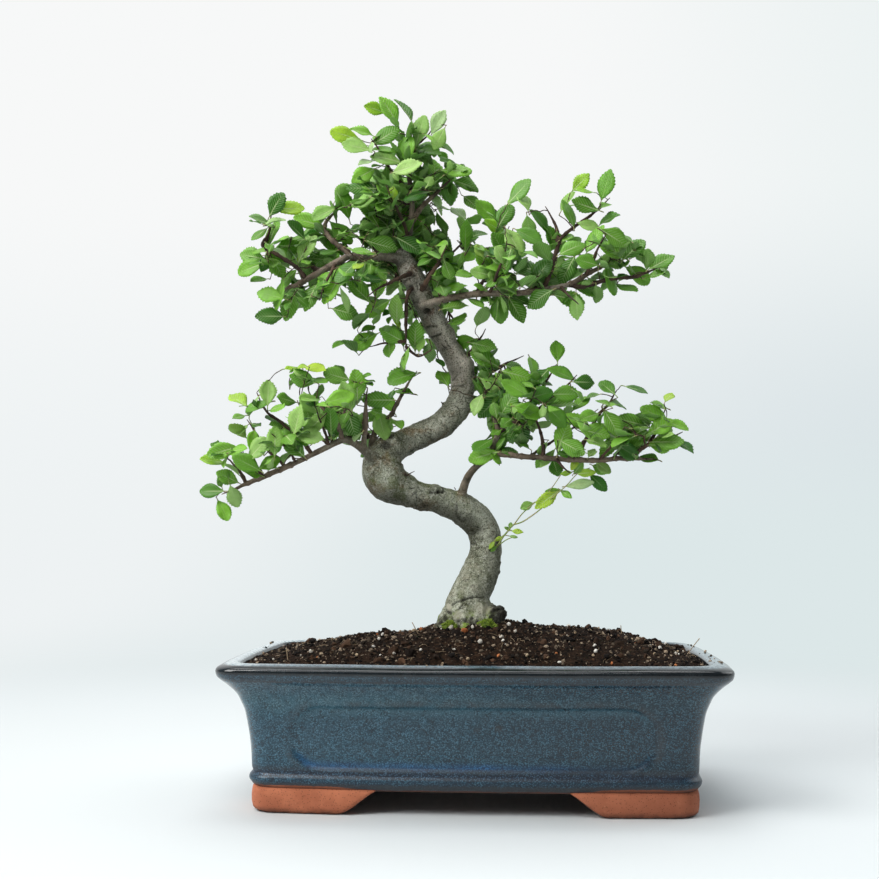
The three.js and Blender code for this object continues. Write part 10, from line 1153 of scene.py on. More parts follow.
# Leaves by shoot. Columns: stalk foot x y z, blade base x y z, midrib direction, upper face normal, length, width, age class, front.
SHOOTS = [
    ("shoot_crown_1", [
        (-70.7, -3.7, 422.4, -68.9, -4.1, 423.7, 0.86, -0.18, 0.47, -0.26, -0.96, 0.11, 22.5, 11.7, 0, 1),
        (-73.4, -10.3, 424.1, -75.3, -10.8, 424.9, -0.93, -0.28, 0.24, 0.29, -0.96, 0, 22.3, 11.1, 1, 1),
        (-40.1, -1.5, 420.3, -39.6, -2.1, 422.6, 0.27, -0.26, 0.93, -0.12, -0.96, -0.23, 22.5, 11.1, 0, 1),
        (-25.1, 0.3, 406.6, -23.2, 0.8, 407, 0.97, 0.26, 0.02, 0.22, -0.85, 0.48, 22.6, 13.3, 0, 1),
        (-46, -11.1, 407.6, -47.9, -11.7, 408.5, -0.93, -0.28, 0.24, 0.34, -0.89, 0.29, 22.2, 12, 0, 1),
        (-50.6, -6, 434.7, -51.6, -6.6, 436.8, -0.47, -0.3, 0.83, 0.5, -0.87, -0.03, 22.4, 12, 0, 1),
        (-45.5, -0.8, 407.2, -45.5, -1.3, 409.5, 0.02, -0.28, 0.96, -0.52, -0.82, -0.23, 22.5, 13.4, 0, 1),
        (-50.3, 3.6, 398, -52, 3.8, 399.4, -0.86, 0.1, 0.5, 0.2, -0.84, 0.5, 22.8, 13.6, 0, 1),
        (-55.5, -19.5, 398.4, -53.5, -19.9, 399.3, 0.96, -0.15, 0.24, -0.2, -0.96, 0.2, 22, 11.4, 0, 1),
        (-45.3, 5.4, 424.7, -43.4, 5.1, 424.5, 0.96, -0.11, -0.27, 0.04, -0.86, 0.5, 22.7, 13.3, 0, 1),
        (-65.3, -18.7, 414.2, -67.2, -18.5, 415.2, -0.96, 0.11, 0.27, -0.03, -0.96, 0.28, 22.2, 11.5, 3, 1),
        (-30.3, -2.7, 427.6, -29.3, -3.4, 429.6, 0.5, -0.34, 0.8, -0.38, -0.91, -0.15, 19.9, 10.1, 2, 1),
        (-40.7, -6.2, 435.8, -41.7, -6, 437.9, -0.5, 0.09, 0.86, 0.72, -0.52, 0.47, 22.5, 12.5, 0, 1),
        (-58.1, -4.3, 444.4, -59.8, -5.2, 445.2, -0.86, -0.47, 0.2, 0.47, -0.88, -0.04, 15.2, 8.5, 1, 1),
        (-18.4, -11.1, 433.7, -19.4, -10.4, 432.6, -0.5, 0.37, -0.79, -0.22, -0.93, -0.29, 17.3, 9.9, 0, 1),
        (-64.9, -10.1, 426.6, -66.7, -10.9, 427.4, -0.89, -0.4, 0.22, 0.45, -0.73, 0.51, 17.1, 8.6, 0, 1),
        (-24.6, 3, 425.3, -23.3, 4.5, 425.4, 0.65, 0.75, -0.13, 0.67, -0.49, 0.55, 14.1, 7.6, 0, 1),
        (-11.3, 12, 413.9, -12.7, 10.6, 414.2, -0.68, -0.73, -0.06, 0.48, -0.5, 0.71, 16.7, 9.3, 0, 1),
        (-71.7, -8.3, 418.7, -69.7, -8.5, 419.1, 0.99, -0.13, -0.02, -0.06, -0.58, 0.81, 19.3, 11, 0, 1),
        (-43.5, -0.1, 424.3, -43.4, -1.6, 426, 0.05, -0.75, 0.66, -0.88, 0.28, 0.38, 16.5, 9.5, 0, 1),
        (-49.2, -0.2, 411.3, -49.8, -1.8, 412.8, -0.31, -0.76, 0.57, 0.6, 0.31, 0.74, 19.3, 9.2, 0, 1),
        (-64.8, -10, 410.6, -66.2, -11.5, 410.5, -0.65, -0.72, -0.24, 0.12, -0.42, 0.9, 13.6, 8.2, 2, 1),
        (-45.9, 20.9, 422.6, -44.1, 20.1, 422.5, 0.89, -0.37, -0.27, 0.05, -0.5, 0.86, 16.1, 8.9, 0, 1),
        (-47.6, 16.8, 400.3, -46.5, 15.4, 401.7, 0.56, -0.69, 0.45, -0.49, 0.17, 0.86, 16.9, 9.9, 0, 1),
        (-50.6, -3.1, 432.1, -51.2, -4.7, 433.7, -0.31, -0.76, 0.57, 0.36, 0.46, 0.81, 11, 5.8, 0, 1),
        (-34.8, -7.6, 429.4, -33.7, -8.9, 428.7, 0.55, -0.61, -0.57, 0.36, -0.44, 0.82, 11, 5.8, 0, 1),
        (-27.5, 9.2, 424.1, -26.4, 10.7, 423.9, 0.58, 0.76, -0.3, 0.09, 0.31, 0.95, 11.3, 6.2, 0, 1),
        (-55.1, -9.3, 405.2, -56.5, -8.1, 406.4, -0.68, 0.6, 0.42, 0.21, -0.4, 0.9, 19.2, 9.3, 0, 1),
        (-68, -14.6, 422.7, -67.9, -15.9, 421.5, 0.04, -0.63, -0.78, -0.71, -0.56, 0.41, 10.9, 6, 2, 1),
        (-44.9, 11, 407.4, -42.9, 11, 407.7, 1, 0.03, -0.07, 0.07, 0.06, 1, 16.1, 8.5, 0, 0),
        (-51.3, 1.3, 410.1, -50.8, 2.6, 411.9, 0.25, 0.67, 0.7, -0.97, 0.19, 0.16, 19.3, 10.5, 0, 0),
        (-42.9, -3.6, 409.3, -41.7, -5.1, 410.4, 0.58, -0.75, 0.33, -0.48, 0.01, 0.87, 15.5, 9.3, 0, 0),
        (-37.2, -0.8, 398.8, -37.3, -2.8, 399.2, -0.03, -1, -0.03, 0.31, -0.04, 0.95, 14.1, 8.1, 0, 0),
        (-49.6, -2.5, 394.8, -47.7, -2, 395.5, 0.96, 0.23, 0.15, -0.08, -0.28, 0.96, 18.3, 9.1, 0, 0),
        (-38.7, 11.3, 419.7, -39.4, 9.6, 419.3, -0.35, -0.85, -0.4, 0.25, -0.49, 0.83, 19, 10.8, 0, 0),
        (-41.3, 1.4, 412.8, -41.1, -0.5, 412.9, 0.07, -0.98, -0.18, -0.04, -0.19, 0.98, 16.3, 8.1, 3, 0),
        (-45.6, 5.7, 425.8, -43.9, 6.4, 425.3, 0.82, 0.35, -0.46, 0.08, 0.72, 0.69, 17.8, 9.1, 0, 0),
        (-68.5, -8.6, 424.2, -67.7, -7.2, 425.7, 0.43, 0.71, 0.55, -0.51, -0.31, 0.8, 13.6, 7.8, 0, 0),
        (-10.2, 9.4, 397.9, -11.5, 8, 398.9, -0.66, -0.69, 0.3, 0.38, 0.04, 0.92, 19.2, 10.6, 0, 0),
        (-38.8, -4, 397.1, -39.2, -6, 397.6, -0.16, -0.99, 0.02, 0.53, -0.07, 0.85, 17.7, 8.8, 0, 0),
        (-67.6, -12.7, 411.8, -66.5, -11, 412.3, 0.52, 0.85, 0.05, 0.09, -0.12, 0.99, 15.6, 8.1, 3, 0),
        (-40.2, 0.7, 431.7, -40.7, 2.3, 433.2, -0.25, 0.8, 0.55, 0.96, 0.11, 0.27, 14.2, 8.4, 0, 0),
        (-50.7, 15.3, 435.5, -50.6, 17.1, 435.1, 0.06, 0.91, -0.42, 0.16, 0.41, 0.9, 15.4, 8.3, 0, 0),
        (-40.4, 7.8, 409, -40.7, 5.9, 408.8, -0.15, -0.94, -0.31, -0.16, -0.28, 0.95, 14.1, 8.3, 0, 0),
        (-19.9, -6.1, 401.5, -21.3, -6.5, 400.6, -0.72, -0.2, -0.67, -0.55, -0.43, 0.72, 12.9, 6.3, 0, 0),
        (-48.7, 6.6, 415.4, -48.1, 8, 417.1, 0.3, 0.72, 0.63, -0.26, -0.57, 0.78, 13.4, 8, 0, 0),
        (-49.7, 17.9, 429.4, -50.7, 19.6, 429.9, -0.5, 0.86, 0.05, -0.27, -0.21, 0.94, 16.2, 9, 0, 0),
        (-43, -3.9, 409.2, -42.5, -4.8, 410.1, 0.39, -0.69, 0.62, -0.42, 0.47, 0.78, 9.9, 5.5, 0, 2),
        (-44.8, 5.5, 424.5, -44.9, 3.6, 424.8, -0.02, -0.98, 0.18, -0.69, 0.14, 0.71, 9.3, 4.6, 0, 2),
        (-40.7, 0.1, 420.2, -39, -0.1, 421, 0.89, -0.08, 0.45, -0.39, -0.65, 0.66, 7.7, 4.8, 0, 2),
        (-70.2, -9.3, 421.2, -71.6, -9.9, 421.3, -0.92, -0.39, 0.06, -0.21, 0.61, 0.76, 7.7, 4, 0, 2),
        (-45.5, 5.6, 425.3, -46.5, 5.5, 426.6, -0.66, -0.02, 0.75, 0.74, -0.21, 0.64, 8.3, 4.3, 0, 2),
        (-45.1, 1.2, 393.4, -45, -0.7, 393.6, 0.06, -0.99, 0.1, 0.03, 0.11, 0.99, 8.1, 4.9, 0, 2),
        (-35.8, 13.7, 418.3, -34.4, 13.1, 417.6, 0.85, -0.31, -0.43, 0.52, 0.34, 0.79, 6.6, 4, 0, 2),
        (-44.9, -8.5, 408, -44.7, -9.2, 409.5, 0.11, -0.41, 0.9, -0.78, 0.53, 0.33, 11.3, 6.3, 0, 2),
        (-41.7, 6.3, 422.7, -40.4, 6.7, 422.4, 0.91, 0.33, -0.24, 0.21, 0.1, 0.97, 7.3, 4.3, 0, 2),
        (-38.2, -2.8, 397.8, -37.5, -2.8, 399, 0.55, 0.02, 0.84, -0.8, 0.31, 0.51, 10.4, 5.8, 3, 2),
        (-39.2, -3.9, 396.8, -38.3, -5.3, 396.7, 0.57, -0.82, -0.08, -0.59, -0.48, 0.65, 7.4, 3.9, 0, 2),
        (-17.2, 1.7, 400.9, -18.4, 1, 400.8, -0.87, -0.5, -0.01, 0.17, -0.31, 0.93, 9.9, 5.9, 0, 2),
        (-25.1, 2.9, 425.7, -25.8, 4.6, 424.8, -0.3, 0.84, -0.45, -0.12, 0.44, 0.89, 9.5, 5.3, 0, 2),
        (-44.4, 8.8, 421.9, -45.7, 9.5, 422, -0.88, 0.47, 0.04, -0.13, -0.32, 0.94, 7, 3.5, 0, 2),
        (-43.1, 4.2, 413.8, -42, 3.4, 414.6, 0.72, -0.48, 0.51, -0.7, -0.47, 0.55, 12.6, 6.6, 0, 2),
        (-33.3, -3.1, 431, -34.8, -3.6, 430.8, -0.95, -0.31, -0.1, 0.02, -0.37, 0.93, 9.3, 5.2, 0, 2),
        (-43.8, 6.1, 409.9, -44, 7.8, 410, -0.12, 0.99, 0.1, 0.36, -0.05, 0.93, 12.7, 6.1, 0, 2),
        (-42.4, 4.2, 423.5, -43.7, 4.1, 423.5, -1, -0.04, 0.02, 0.03, -0.55, 0.83, 12.4, 6.3, 0, 2),
        (-44.9, 12.8, 422.4, -43.8, 13.6, 421.9, 0.74, 0.57, -0.36, 0.05, 0.49, 0.87, 9.2, 5.3, 0, 2),
        (-45.1, 14.9, 422.9, -45, 14.8, 424.7, 0.05, -0.05, 1, -0.53, -0.85, -0.02, 6.5, 3.9, 0, 2),
        (-45.1, 15.2, 422.7, -46.2, 16.6, 421.9, -0.56, 0.7, -0.44, -0.12, 0.46, 0.88, 8.8, 5, 1, 2),
        (-44.6, 7.2, 407.9, -43.5, 7.9, 408.4, 0.77, 0.5, 0.41, -0.12, -0.51, 0.85, 12.1, 6.4, 0, 2),
        (-40.9, -1.9, 434, -40.7, -3.8, 433.8, 0.1, -0.99, -0.08, -0.12, -0.09, 0.99, 8, 4.3, 0, 2),
        (-16.7, 7.8, 407.6, -16.2, 6.2, 408.2, 0.32, -0.88, 0.34, -0.25, 0.27, 0.93, 7.6, 4.3, 0, 2),
        (-48.1, 15.3, 409, -48.6, 14.7, 410.3, -0.3, -0.43, 0.85, -0.18, 0.9, 0.39, 9.2, 5.2, 0, 2),
        (-48.5, 0.7, 396.9, -49.8, 1, 397.2, -0.96, 0.18, 0.22, -0.03, -0.82, 0.57, 12, 7, 0, 2),
        (-45.2, 1.1, 406.9, -44.3, 0.3, 405.9, 0.56, -0.54, -0.63, 0.69, -0.11, 0.72, 6.7, 4, 0, 2),
        (-50.8, 0.9, 410.4, -51.9, -0.1, 410.5, -0.74, -0.66, 0.09, 0.16, -0.05, 0.99, 10.6, 5.7, 0, 2),
        (-7.1, 11.8, 409, -7.2, 10.6, 408.8, -0.11, -0.98, -0.15, -0.2, -0.13, 0.97, 8.9, 5.1, 0, 2),
        (-49.3, 17.8, 429, -49.9, 17, 430.3, -0.34, -0.49, 0.8, -0.02, 0.86, 0.52, 12.3, 7.5, 0, 2),
        (-47.2, 2.6, 410.6, -48.4, 2.5, 411.1, -0.92, -0.02, 0.4, 0.34, -0.57, 0.75, 12.7, 6.3, 0, 2),
        (-27.1, 0.7, 405.3, -26.4, 1.8, 406.1, 0.51, 0.69, 0.51, 0.4, -0.72, 0.57, 7.3, 3.7, 0, 2),
        (-19.2, -4.4, 401.2, -18.4, -5.7, 402.6, 0.37, -0.6, 0.7, 0.63, 0.72, 0.29, 9.7, 5.4, 0, 2),
        (-26.2, -3.5, 435.1, -24.5, -4, 436.3, 0.8, -0.22, 0.56, -0.42, 0.45, 0.78, 7.5, 3.8, 3, 2),
        (-42.3, 3.5, 419.8, -41.2, 3.8, 419.1, 0.85, 0.22, -0.49, 0.52, -0.51, 0.68, 12, 5.8, 0, 2),
        (-28.1, 4.3, 427.2, -26.4, 4.9, 426.7, 0.9, 0.36, -0.25, 0.44, -0.76, 0.48, 7.2, 3.7, 0, 2),
        (-31.2, 0.6, 403, -31.4, 1.7, 403.5, -0.15, 0.9, 0.41, -0.02, -0.42, 0.91, 10.8, 6, 0, 2),
        (-62, -9.1, 411.4, -63.4, -7.8, 412.2, -0.67, 0.63, 0.38, 0.13, -0.41, 0.9, 8.6, 4.5, 0, 2),
        (-44.2, -7, 408.3, -43.5, -7.6, 406.9, 0.44, -0.36, -0.82, 0.79, -0.28, 0.55, 9.6, 5.2, 0, 2),
        (-41.6, 2.5, 419.9, -41.2, 1.8, 421.7, 0.21, -0.34, 0.91, 0.03, 0.94, 0.35, 10.6, 5.1, 3, 2),
        (-16.7, 9, 407.3, -17.3, 8.4, 408.5, -0.41, -0.43, 0.8, 0.1, 0.85, 0.51, 7.3, 4, 0, 2),
        (-45.6, 6.2, 414.7, -45.9, 5.3, 415.7, -0.16, -0.69, 0.7, 0.45, -0.69, -0.57, 8.4, 5, 0, 2),
        (-45.3, -9.5, 407.8, -45.1, -10.7, 406.8, 0.14, -0.76, -0.64, 0.21, -0.61, 0.77, 8.2, 4.7, 0, 2),
        (-55.1, -10.2, 404.6, -53.4, -11.2, 403.9, 0.8, -0.49, -0.34, 0.59, 0.53, 0.61, 10.9, 6.8, 0, 2),
        (-47.6, 0.4, 432.2, -48.7, 0.9, 432.4, -0.9, 0.4, 0.19, -0.02, -0.48, 0.88, 11.4, 6.7, 3, 2),
        (-41, 7.5, 422, -41.9, 7.5, 420.6, -0.53, 0, -0.85, -0.84, -0.17, 0.52, 6.9, 4.2, 0, 2),
        (-37.6, -1.6, 398.4, -35.7, -1.3, 399, 0.94, 0.17, 0.31, -0.35, 0.53, 0.77, 8.6, 4.3, 0, 2),
        (-17.3, 1.2, 400.8, -16.3, -0.1, 400.3, 0.55, -0.78, -0.3, -0.65, -0.63, 0.42, 7.3, 3.7, 0, 2),
    ]),
    ("shoot_crown_2", [
        (-22.8, 21.2, 412.2, -22.3, 21.8, 410.7, 0.24, 0.29, -0.93, 0.58, -0.81, -0.11, 23.2, 13.2, 0, 1),
        (-45.8, 10.7, 364, -44.4, 11.1, 365.8, 0.68, 0.18, 0.71, -0.15, -0.91, 0.38, 22.9, 12.7, 0, 1),
        (-42.7, 27.7, 392.3, -42.2, 28, 394.7, 0.25, 0.13, 0.96, -0.39, -0.89, 0.23, 23.4, 13.4, 0, 1),
        (-16.6, 4.1, 401.2, -14.8, 4.9, 401.2, 0.89, 0.39, -0.22, 0.45, -0.83, 0.34, 20.3, 11.1, 0, 1),
        (-51.2, 15.3, 366.1, -51.2, 15.5, 368.5, -0.01, 0.11, 0.99, 0.57, -0.82, 0.1, 23, 13.1, 0, 1),
        (-28.4, 22.2, 398.5, -28.4, 22.4, 400.9, -0.01, 0.11, 0.99, 0.57, -0.81, 0.1, 23.2, 13.3, 0, 1),
        (-5.5, 21.6, 377, -6.7, 22.6, 378.6, -0.6, 0.51, 0.62, 0.11, -0.71, 0.69, 18, 8.9, 0, 1),
        (-56.3, 30.5, 391.3, -55.8, 30.8, 393.6, 0.25, 0.13, 0.96, -0.02, -0.99, 0.14, 23.5, 11.6, 0, 1),
        (-36.1, 26.1, 404.8, -35.1, 26.7, 403.5, 0.47, 0.3, -0.83, 0.81, -0.53, 0.27, 23.4, 12.2, 0, 1),
        (-28, 24.2, 386.2, -27.4, 25.7, 385.5, 0.31, 0.76, -0.57, 0.66, 0.25, 0.7, 20.2, 11.9, 0, 1),
        (-45.3, 32.1, 384.6, -44.5, 30.6, 386.1, 0.41, -0.71, 0.57, -0.48, 0.36, 0.8, 17.1, 9.8, 0, 1),
        (-26.7, 19.6, 385.7, -25.4, 21, 386.6, 0.65, 0.72, 0.24, 0.29, -0.53, 0.79, 11.4, 6.2, 0, 1),
        (-23.6, 35.2, 397, -24.7, 33.9, 398.5, -0.55, -0.63, 0.54, 0.13, 0.58, 0.81, 17.4, 9.6, 0, 1),
        (-32.4, 20.2, 389.5, -32, 21.3, 388.2, 0.2, 0.53, -0.83, 0.75, 0.46, 0.47, 13.8, 7.5, 0, 1),
        (-46.7, 21.2, 385.2, -47.2, 22.5, 387.1, -0.23, 0.61, 0.75, 0.68, -0.45, 0.57, 14.3, 8.4, 0, 1),
        (-56.4, 13.3, 378.3, -57.7, 14.3, 380, -0.62, 0.47, 0.63, 0.5, -0.38, 0.78, 20.3, 12, 0, 1),
        (-67.3, 15.1, 403.7, -65.7, 16, 403.2, 0.77, 0.46, -0.43, 0.63, -0.45, 0.64, 13.3, 7.9, 0, 1),
        (-35.5, 5.7, 384.9, -35.2, 7, 386.8, 0.15, 0.64, 0.75, -0.62, -0.53, 0.57, 11.2, 5.3, 0, 1),
        (-35.4, 14, 418.1, -35.5, 15.5, 417.2, -0.05, 0.75, -0.66, -0.73, 0.43, 0.53, 11.4, 5.8, 0, 1),
        (-15.4, 22.8, 408.7, -15, 21.5, 407.6, 0.23, -0.61, -0.75, 0.74, -0.4, 0.55, 11.3, 6, 0, 1),
        (-14.3, 19.2, 405.8, -15.7, 20.4, 407, -0.67, 0.61, 0.42, 0.14, -0.45, 0.88, 11.4, 6.3, 0, 1),
        (-50.6, 18.1, 410.5, -51.4, 19.6, 409.9, -0.4, 0.76, -0.52, 0.15, 0.61, 0.78, 19.4, 9.9, 3, 0),
        (-33.3, 15.9, 369.3, -33.7, 17.8, 369.9, -0.19, 0.98, 0.07, 0.24, -0.02, 0.97, 16, 8.4, 0, 0),
        (-44.6, 40.3, 383, -44.4, 42.1, 384.3, 0.12, 0.9, 0.42, -0.93, 0.25, -0.26, 16, 9.5, 0, 0),
        (-38, 43.7, 388.5, -38.6, 45.4, 388, -0.27, 0.85, -0.46, -0.15, 0.43, 0.89, 12.7, 7.6, 0, 0),
        (-41.6, 28, 393.6, -40.5, 27.3, 392.4, 0.56, -0.34, -0.76, 0.05, -0.9, 0.44, 15.1, 8.4, 0, 0),
        (-33, 27.2, 381.9, -33.7, 28.6, 381, -0.34, 0.67, -0.66, 0.15, 0.73, 0.66, 17.7, 9.8, 0, 0),
        (-60.4, 39.3, 382.1, -59.4, 40, 384, 0.5, 0.37, 0.78, -0.85, 0.01, 0.53, 18.2, 9.9, 0, 0),
        (-36.5, 27, 384.1, -37.2, 28.8, 384.1, -0.38, 0.9, -0.21, 0.11, 0.27, 0.96, 16.4, 9.8, 0, 0),
        (-38.2, 19.1, 376, -38.8, 20.9, 375.9, -0.26, 0.93, -0.27, -0.38, 0.16, 0.91, 17.3, 9.6, 0, 0),
        (-49.2, 30, 402.8, -48.7, 31.8, 403.8, 0.2, 0.92, 0.34, 0.55, -0.4, 0.74, 17.5, 9.7, 0, 0),
        (-37.3, 30.1, 405.1, -36.7, 30.8, 407.3, 0.31, 0.34, 0.89, -0.8, 0.59, 0.05, 18.4, 10.2, 0, 0),
        (-38.9, 26.8, 375, -40.1, 28.4, 375.6, -0.62, 0.78, 0.06, -0.29, -0.31, 0.91, 18.4, 10.9, 0, 0),
        (-36.8, 10.2, 395.8, -37.8, 9.3, 394.7, -0.5, -0.45, -0.74, -0.85, 0.41, 0.32, 14.4, 7.6, 0, 0),
        (-46.2, 11.9, 383, -46.4, 13.8, 383.1, -0.09, 0.99, -0.12, 0, 0.12, 0.99, 15.5, 9.3, 0, 0),
        (-38.8, 32.8, 395.4, -40.1, 34.3, 396.3, -0.65, 0.72, 0.22, 0.29, -0.04, 0.96, 13.2, 6.4, 0, 0),
        (-51.6, 28.8, 390.4, -53.3, 29.7, 391.3, -0.87, 0.43, 0.24, 0.37, 0.25, 0.89, 13.3, 7.9, 3, 0),
        (-43, -4.5, 391.6, -43.8, -2.7, 392.4, -0.4, 0.9, 0.17, 0.11, -0.14, 0.98, 18.1, 10.8, 0, 0),
        (-43.9, 30.5, 388.6, -42.9, 31.2, 387.4, 0.51, 0.32, -0.8, 0.64, 0.48, 0.6, 19, 9.8, 0, 0),
        (-47.8, 20.7, 398.9, -46, 21.4, 399.1, 0.93, 0.36, -0.11, 0.04, 0.18, 0.98, 13.9, 7.5, 0, 0),
        (-48.7, 1.5, 397.4, -48.9, 3.5, 397.7, -0.12, 0.99, -0.09, 0.63, 0.14, 0.76, 17.4, 9.7, 0, 0),
        (-43.8, 12.7, 387.8, -44.6, 14.4, 387.6, -0.39, 0.85, -0.34, -0.03, 0.36, 0.93, 18, 10.4, 0, 0),
        (-64.7, 25.8, 391.4, -63.7, 26.7, 390.4, 0.52, 0.46, -0.72, -0.28, 0.89, 0.36, 17.8, 10.3, 0, 0),
        (-39.8, 1.1, 386.1, -39, 2.9, 385.9, 0.39, 0.87, -0.3, -0.31, 0.43, 0.85, 15.4, 8.5, 0, 0),
        (-16.7, 7.8, 407.6, -17.4, 9.6, 408.5, -0.37, 0.9, 0.24, -0.15, -0.31, 0.94, 17.6, 8.8, 3, 0),
        (-47.2, 21.1, 381.1, -47.9, 23, 381.6, -0.35, 0.93, 0.06, -0.02, -0.08, 1, 14.3, 7.3, 0, 0),
        (-59, 33, 399.8, -57.7, 34.4, 399.5, 0.63, 0.68, -0.38, -0.63, 0.73, 0.27, 18.7, 9.1, 0, 0),
        (-29.2, 33.1, 395.6, -29.3, 35, 396.6, -0.04, 0.96, 0.28, 1, 0.06, -0.07, 12.6, 6.8, 0, 0),
        (-21.5, 7.2, 395.9, -23.3, 8.1, 396.5, -0.87, 0.47, 0.14, -0.01, -0.31, 0.95, 16.2, 8.3, 3, 0),
        (-29, 21.8, 411.1, -28.6, 23.8, 411.6, 0.19, 0.98, 0.08, -0.36, -0.01, 0.93, 16, 9.4, 0, 0),
        (-37.1, 36.9, 375.1, -36.1, 38.6, 375.5, 0.5, 0.87, -0.02, 0.19, -0.09, 0.98, 16.7, 9.1, 0, 0),
        (-53.2, 19.1, 402.4, -52, 20.4, 401.8, 0.61, 0.63, -0.49, 0.22, 0.46, 0.86, 12.6, 7.5, 0, 0),
        (-37, 43.5, 374.7, -36.7, 43.7, 377, 0.19, 0.13, 0.97, -0.98, 0.13, 0.17, 17.2, 10.2, 0, 0),
        (-29.1, 22.2, 386, -30.3, 23.1, 385.1, -0.59, 0.45, -0.67, -0.06, 0.8, 0.59, 14.9, 8.2, 0, 0),
        (-5.7, 10.6, 409.1, -5.4, 12, 408, 0.11, 0.68, -0.72, 0.65, 0.5, 0.57, 13.5, 8, 0, 0),
        (-47.3, 49.7, 397.8, -45.8, 50.3, 399.3, 0.77, 0.32, 0.55, -0.63, 0.26, 0.73, 17.2, 9.5, 0, 0),
        (-16.9, 7.3, 407.5, -15.9, 8.8, 408.8, 0.46, 0.76, 0.46, -0.59, -0.13, 0.8, 14.9, 7.7, 0, 0),
        (-43.6, 30.1, 394.5, -43, 31.9, 395.7, 0.29, 0.88, 0.37, 0.17, -0.43, 0.89, 15.9, 8.2, 3, 0),
        (-34.5, 42.8, 383.9, -35.2, 44.2, 383.1, -0.38, 0.7, -0.61, -0.32, 0.52, 0.8, 14.1, 7, 0, 0),
        (-64.5, 42.7, 392.9, -64.2, 42.5, 394.8, 0.15, -0.08, 0.99, 0.16, 0.99, 0.06, 7.2, 3.7, 0, 2),
        (-60.1, 39.4, 383.4, -59.9, 37.5, 382.8, 0.1, -0.94, -0.33, -0.17, -0.34, 0.93, 6.6, 3.8, 0, 2),
        (-38.8, 32.5, 396.5, -38.1, 33.1, 397.6, 0.46, 0.45, 0.76, -0.18, -0.8, 0.58, 12.4, 7.5, 0, 2),
        (-59.6, 29.2, 391.3, -60.5, 30.5, 391.1, -0.59, 0.8, -0.11, -0.58, -0.32, 0.75, 9.2, 4.5, 0, 2),
        (-23.6, 10.1, 396.4, -24.3, 8.7, 396.4, -0.44, -0.9, 0, -0.02, 0.02, 1, 7.5, 4.2, 0, 2),
        (-28.2, 21.7, 398.4, -28.9, 21.8, 399.8, -0.46, 0.05, 0.89, 0.73, 0.59, 0.35, 7.2, 3.6, 0, 2),
        (-50, 31.2, 370.3, -50.6, 29.9, 371.6, -0.3, -0.71, 0.64, 0.48, 0.46, 0.75, 7.2, 4.4, 0, 2),
        (-43.1, 55.8, 384.3, -44.2, 54.6, 384.1, -0.66, -0.74, -0.16, -0.51, 0.28, 0.82, 9.8, 4.9, 0, 2),
        (-46.5, 15.2, 383.4, -48, 16, 382.4, -0.77, 0.44, -0.46, -0.58, -0.19, 0.8, 10.6, 6.5, 3, 2),
        (-45.4, 12.7, 406, -46.7, 13.2, 406.3, -0.91, 0.36, 0.19, 0.18, -0.06, 0.98, 9.4, 5.4, 0, 2),
        (-37, 29, 405, -37.7, 27.7, 405, -0.48, -0.88, -0.02, 0.23, -0.15, 0.96, 9.9, 4.9, 0, 2),
        (-49.1, 29.7, 402.6, -48.1, 30.2, 404.3, 0.49, 0.27, 0.83, -0.78, -0.28, 0.56, 10.9, 6.6, 0, 2),
        (-30.2, 38.6, 394.9, -30.2, 37.2, 395.7, 0.02, -0.86, 0.5, -0.09, 0.5, 0.86, 9.4, 5.2, 0, 2),
        (-35.3, 45.2, 374.8, -33.7, 45.5, 374.8, 0.98, 0.17, 0.05, -0.08, 0.16, 0.98, 11.6, 6.1, 0, 2),
        (-36.6, 28.1, 382.8, -36.2, 26.7, 382.5, 0.29, -0.93, -0.22, -0.1, -0.26, 0.96, 7.9, 3.9, 0, 2),
        (-20.4, 18.7, 410.1, -20.5, 19.9, 410.4, -0.08, 0.96, 0.27, -0.13, -0.28, 0.95, 7, 4.1, 3, 2),
        (-41.1, 16.2, 369.5, -40.7, 14.9, 370.1, 0.25, -0.9, 0.36, -0.59, 0.15, 0.79, 6.5, 3.4, 0, 2),
        (-48.7, 17.3, 400.8, -50, 17.9, 400.5, -0.88, 0.44, -0.19, -0.17, 0.09, 0.98, 7, 3.5, 0, 2),
        (-16, 14.7, 406.1, -16.6, 14.5, 407.9, -0.33, -0.11, 0.94, -0.68, -0.66, -0.32, 9.2, 5, 0, 2),
        (-34.6, 37.7, 387.7, -33.2, 37.4, 387.1, 0.9, -0.17, -0.41, 0.33, -0.39, 0.86, 11.3, 5.7, 0, 2),
        (-10.3, 9.5, 398.1, -8.5, 9.2, 397.5, 0.95, -0.13, -0.3, 0.31, 0.09, 0.95, 11.3, 5.9, 0, 2),
        (-55.5, 29, 387, -55.6, 28.4, 386, -0.08, -0.51, -0.86, 0.47, -0.78, 0.42, 11.1, 6.5, 0, 2),
        (-31.8, 36.3, 395.1, -31.3, 35.3, 394.6, 0.4, -0.8, -0.45, 0.28, -0.36, 0.89, 7, 4, 0, 2),
        (-36.9, 30.2, 380.7, -37.4, 30.6, 378.7, -0.23, 0.17, -0.96, -0.96, 0.11, 0.25, 11.7, 6.1, 0, 2),
        (-40.3, 33.6, 360.9, -39.3, 32.8, 361.2, 0.76, -0.61, 0.2, -0.51, -0.38, 0.77, 12.8, 6.3, 0, 2),
        (-15.7, 15.1, 405.8, -15.9, 15, 404.4, -0.14, -0.08, -0.99, -0.77, -0.62, 0.15, 10.7, 5.6, 0, 2),
        (-14.5, 19.7, 406.2, -16.1, 20.3, 406.4, -0.93, 0.35, 0.12, 0.26, 0.4, 0.88, 11.3, 6.5, 0, 2),
        (-34, 10, 394.6, -33.8, 11.3, 395.8, 0.09, 0.73, 0.68, -0.02, -0.68, 0.73, 12, 7, 0, 2),
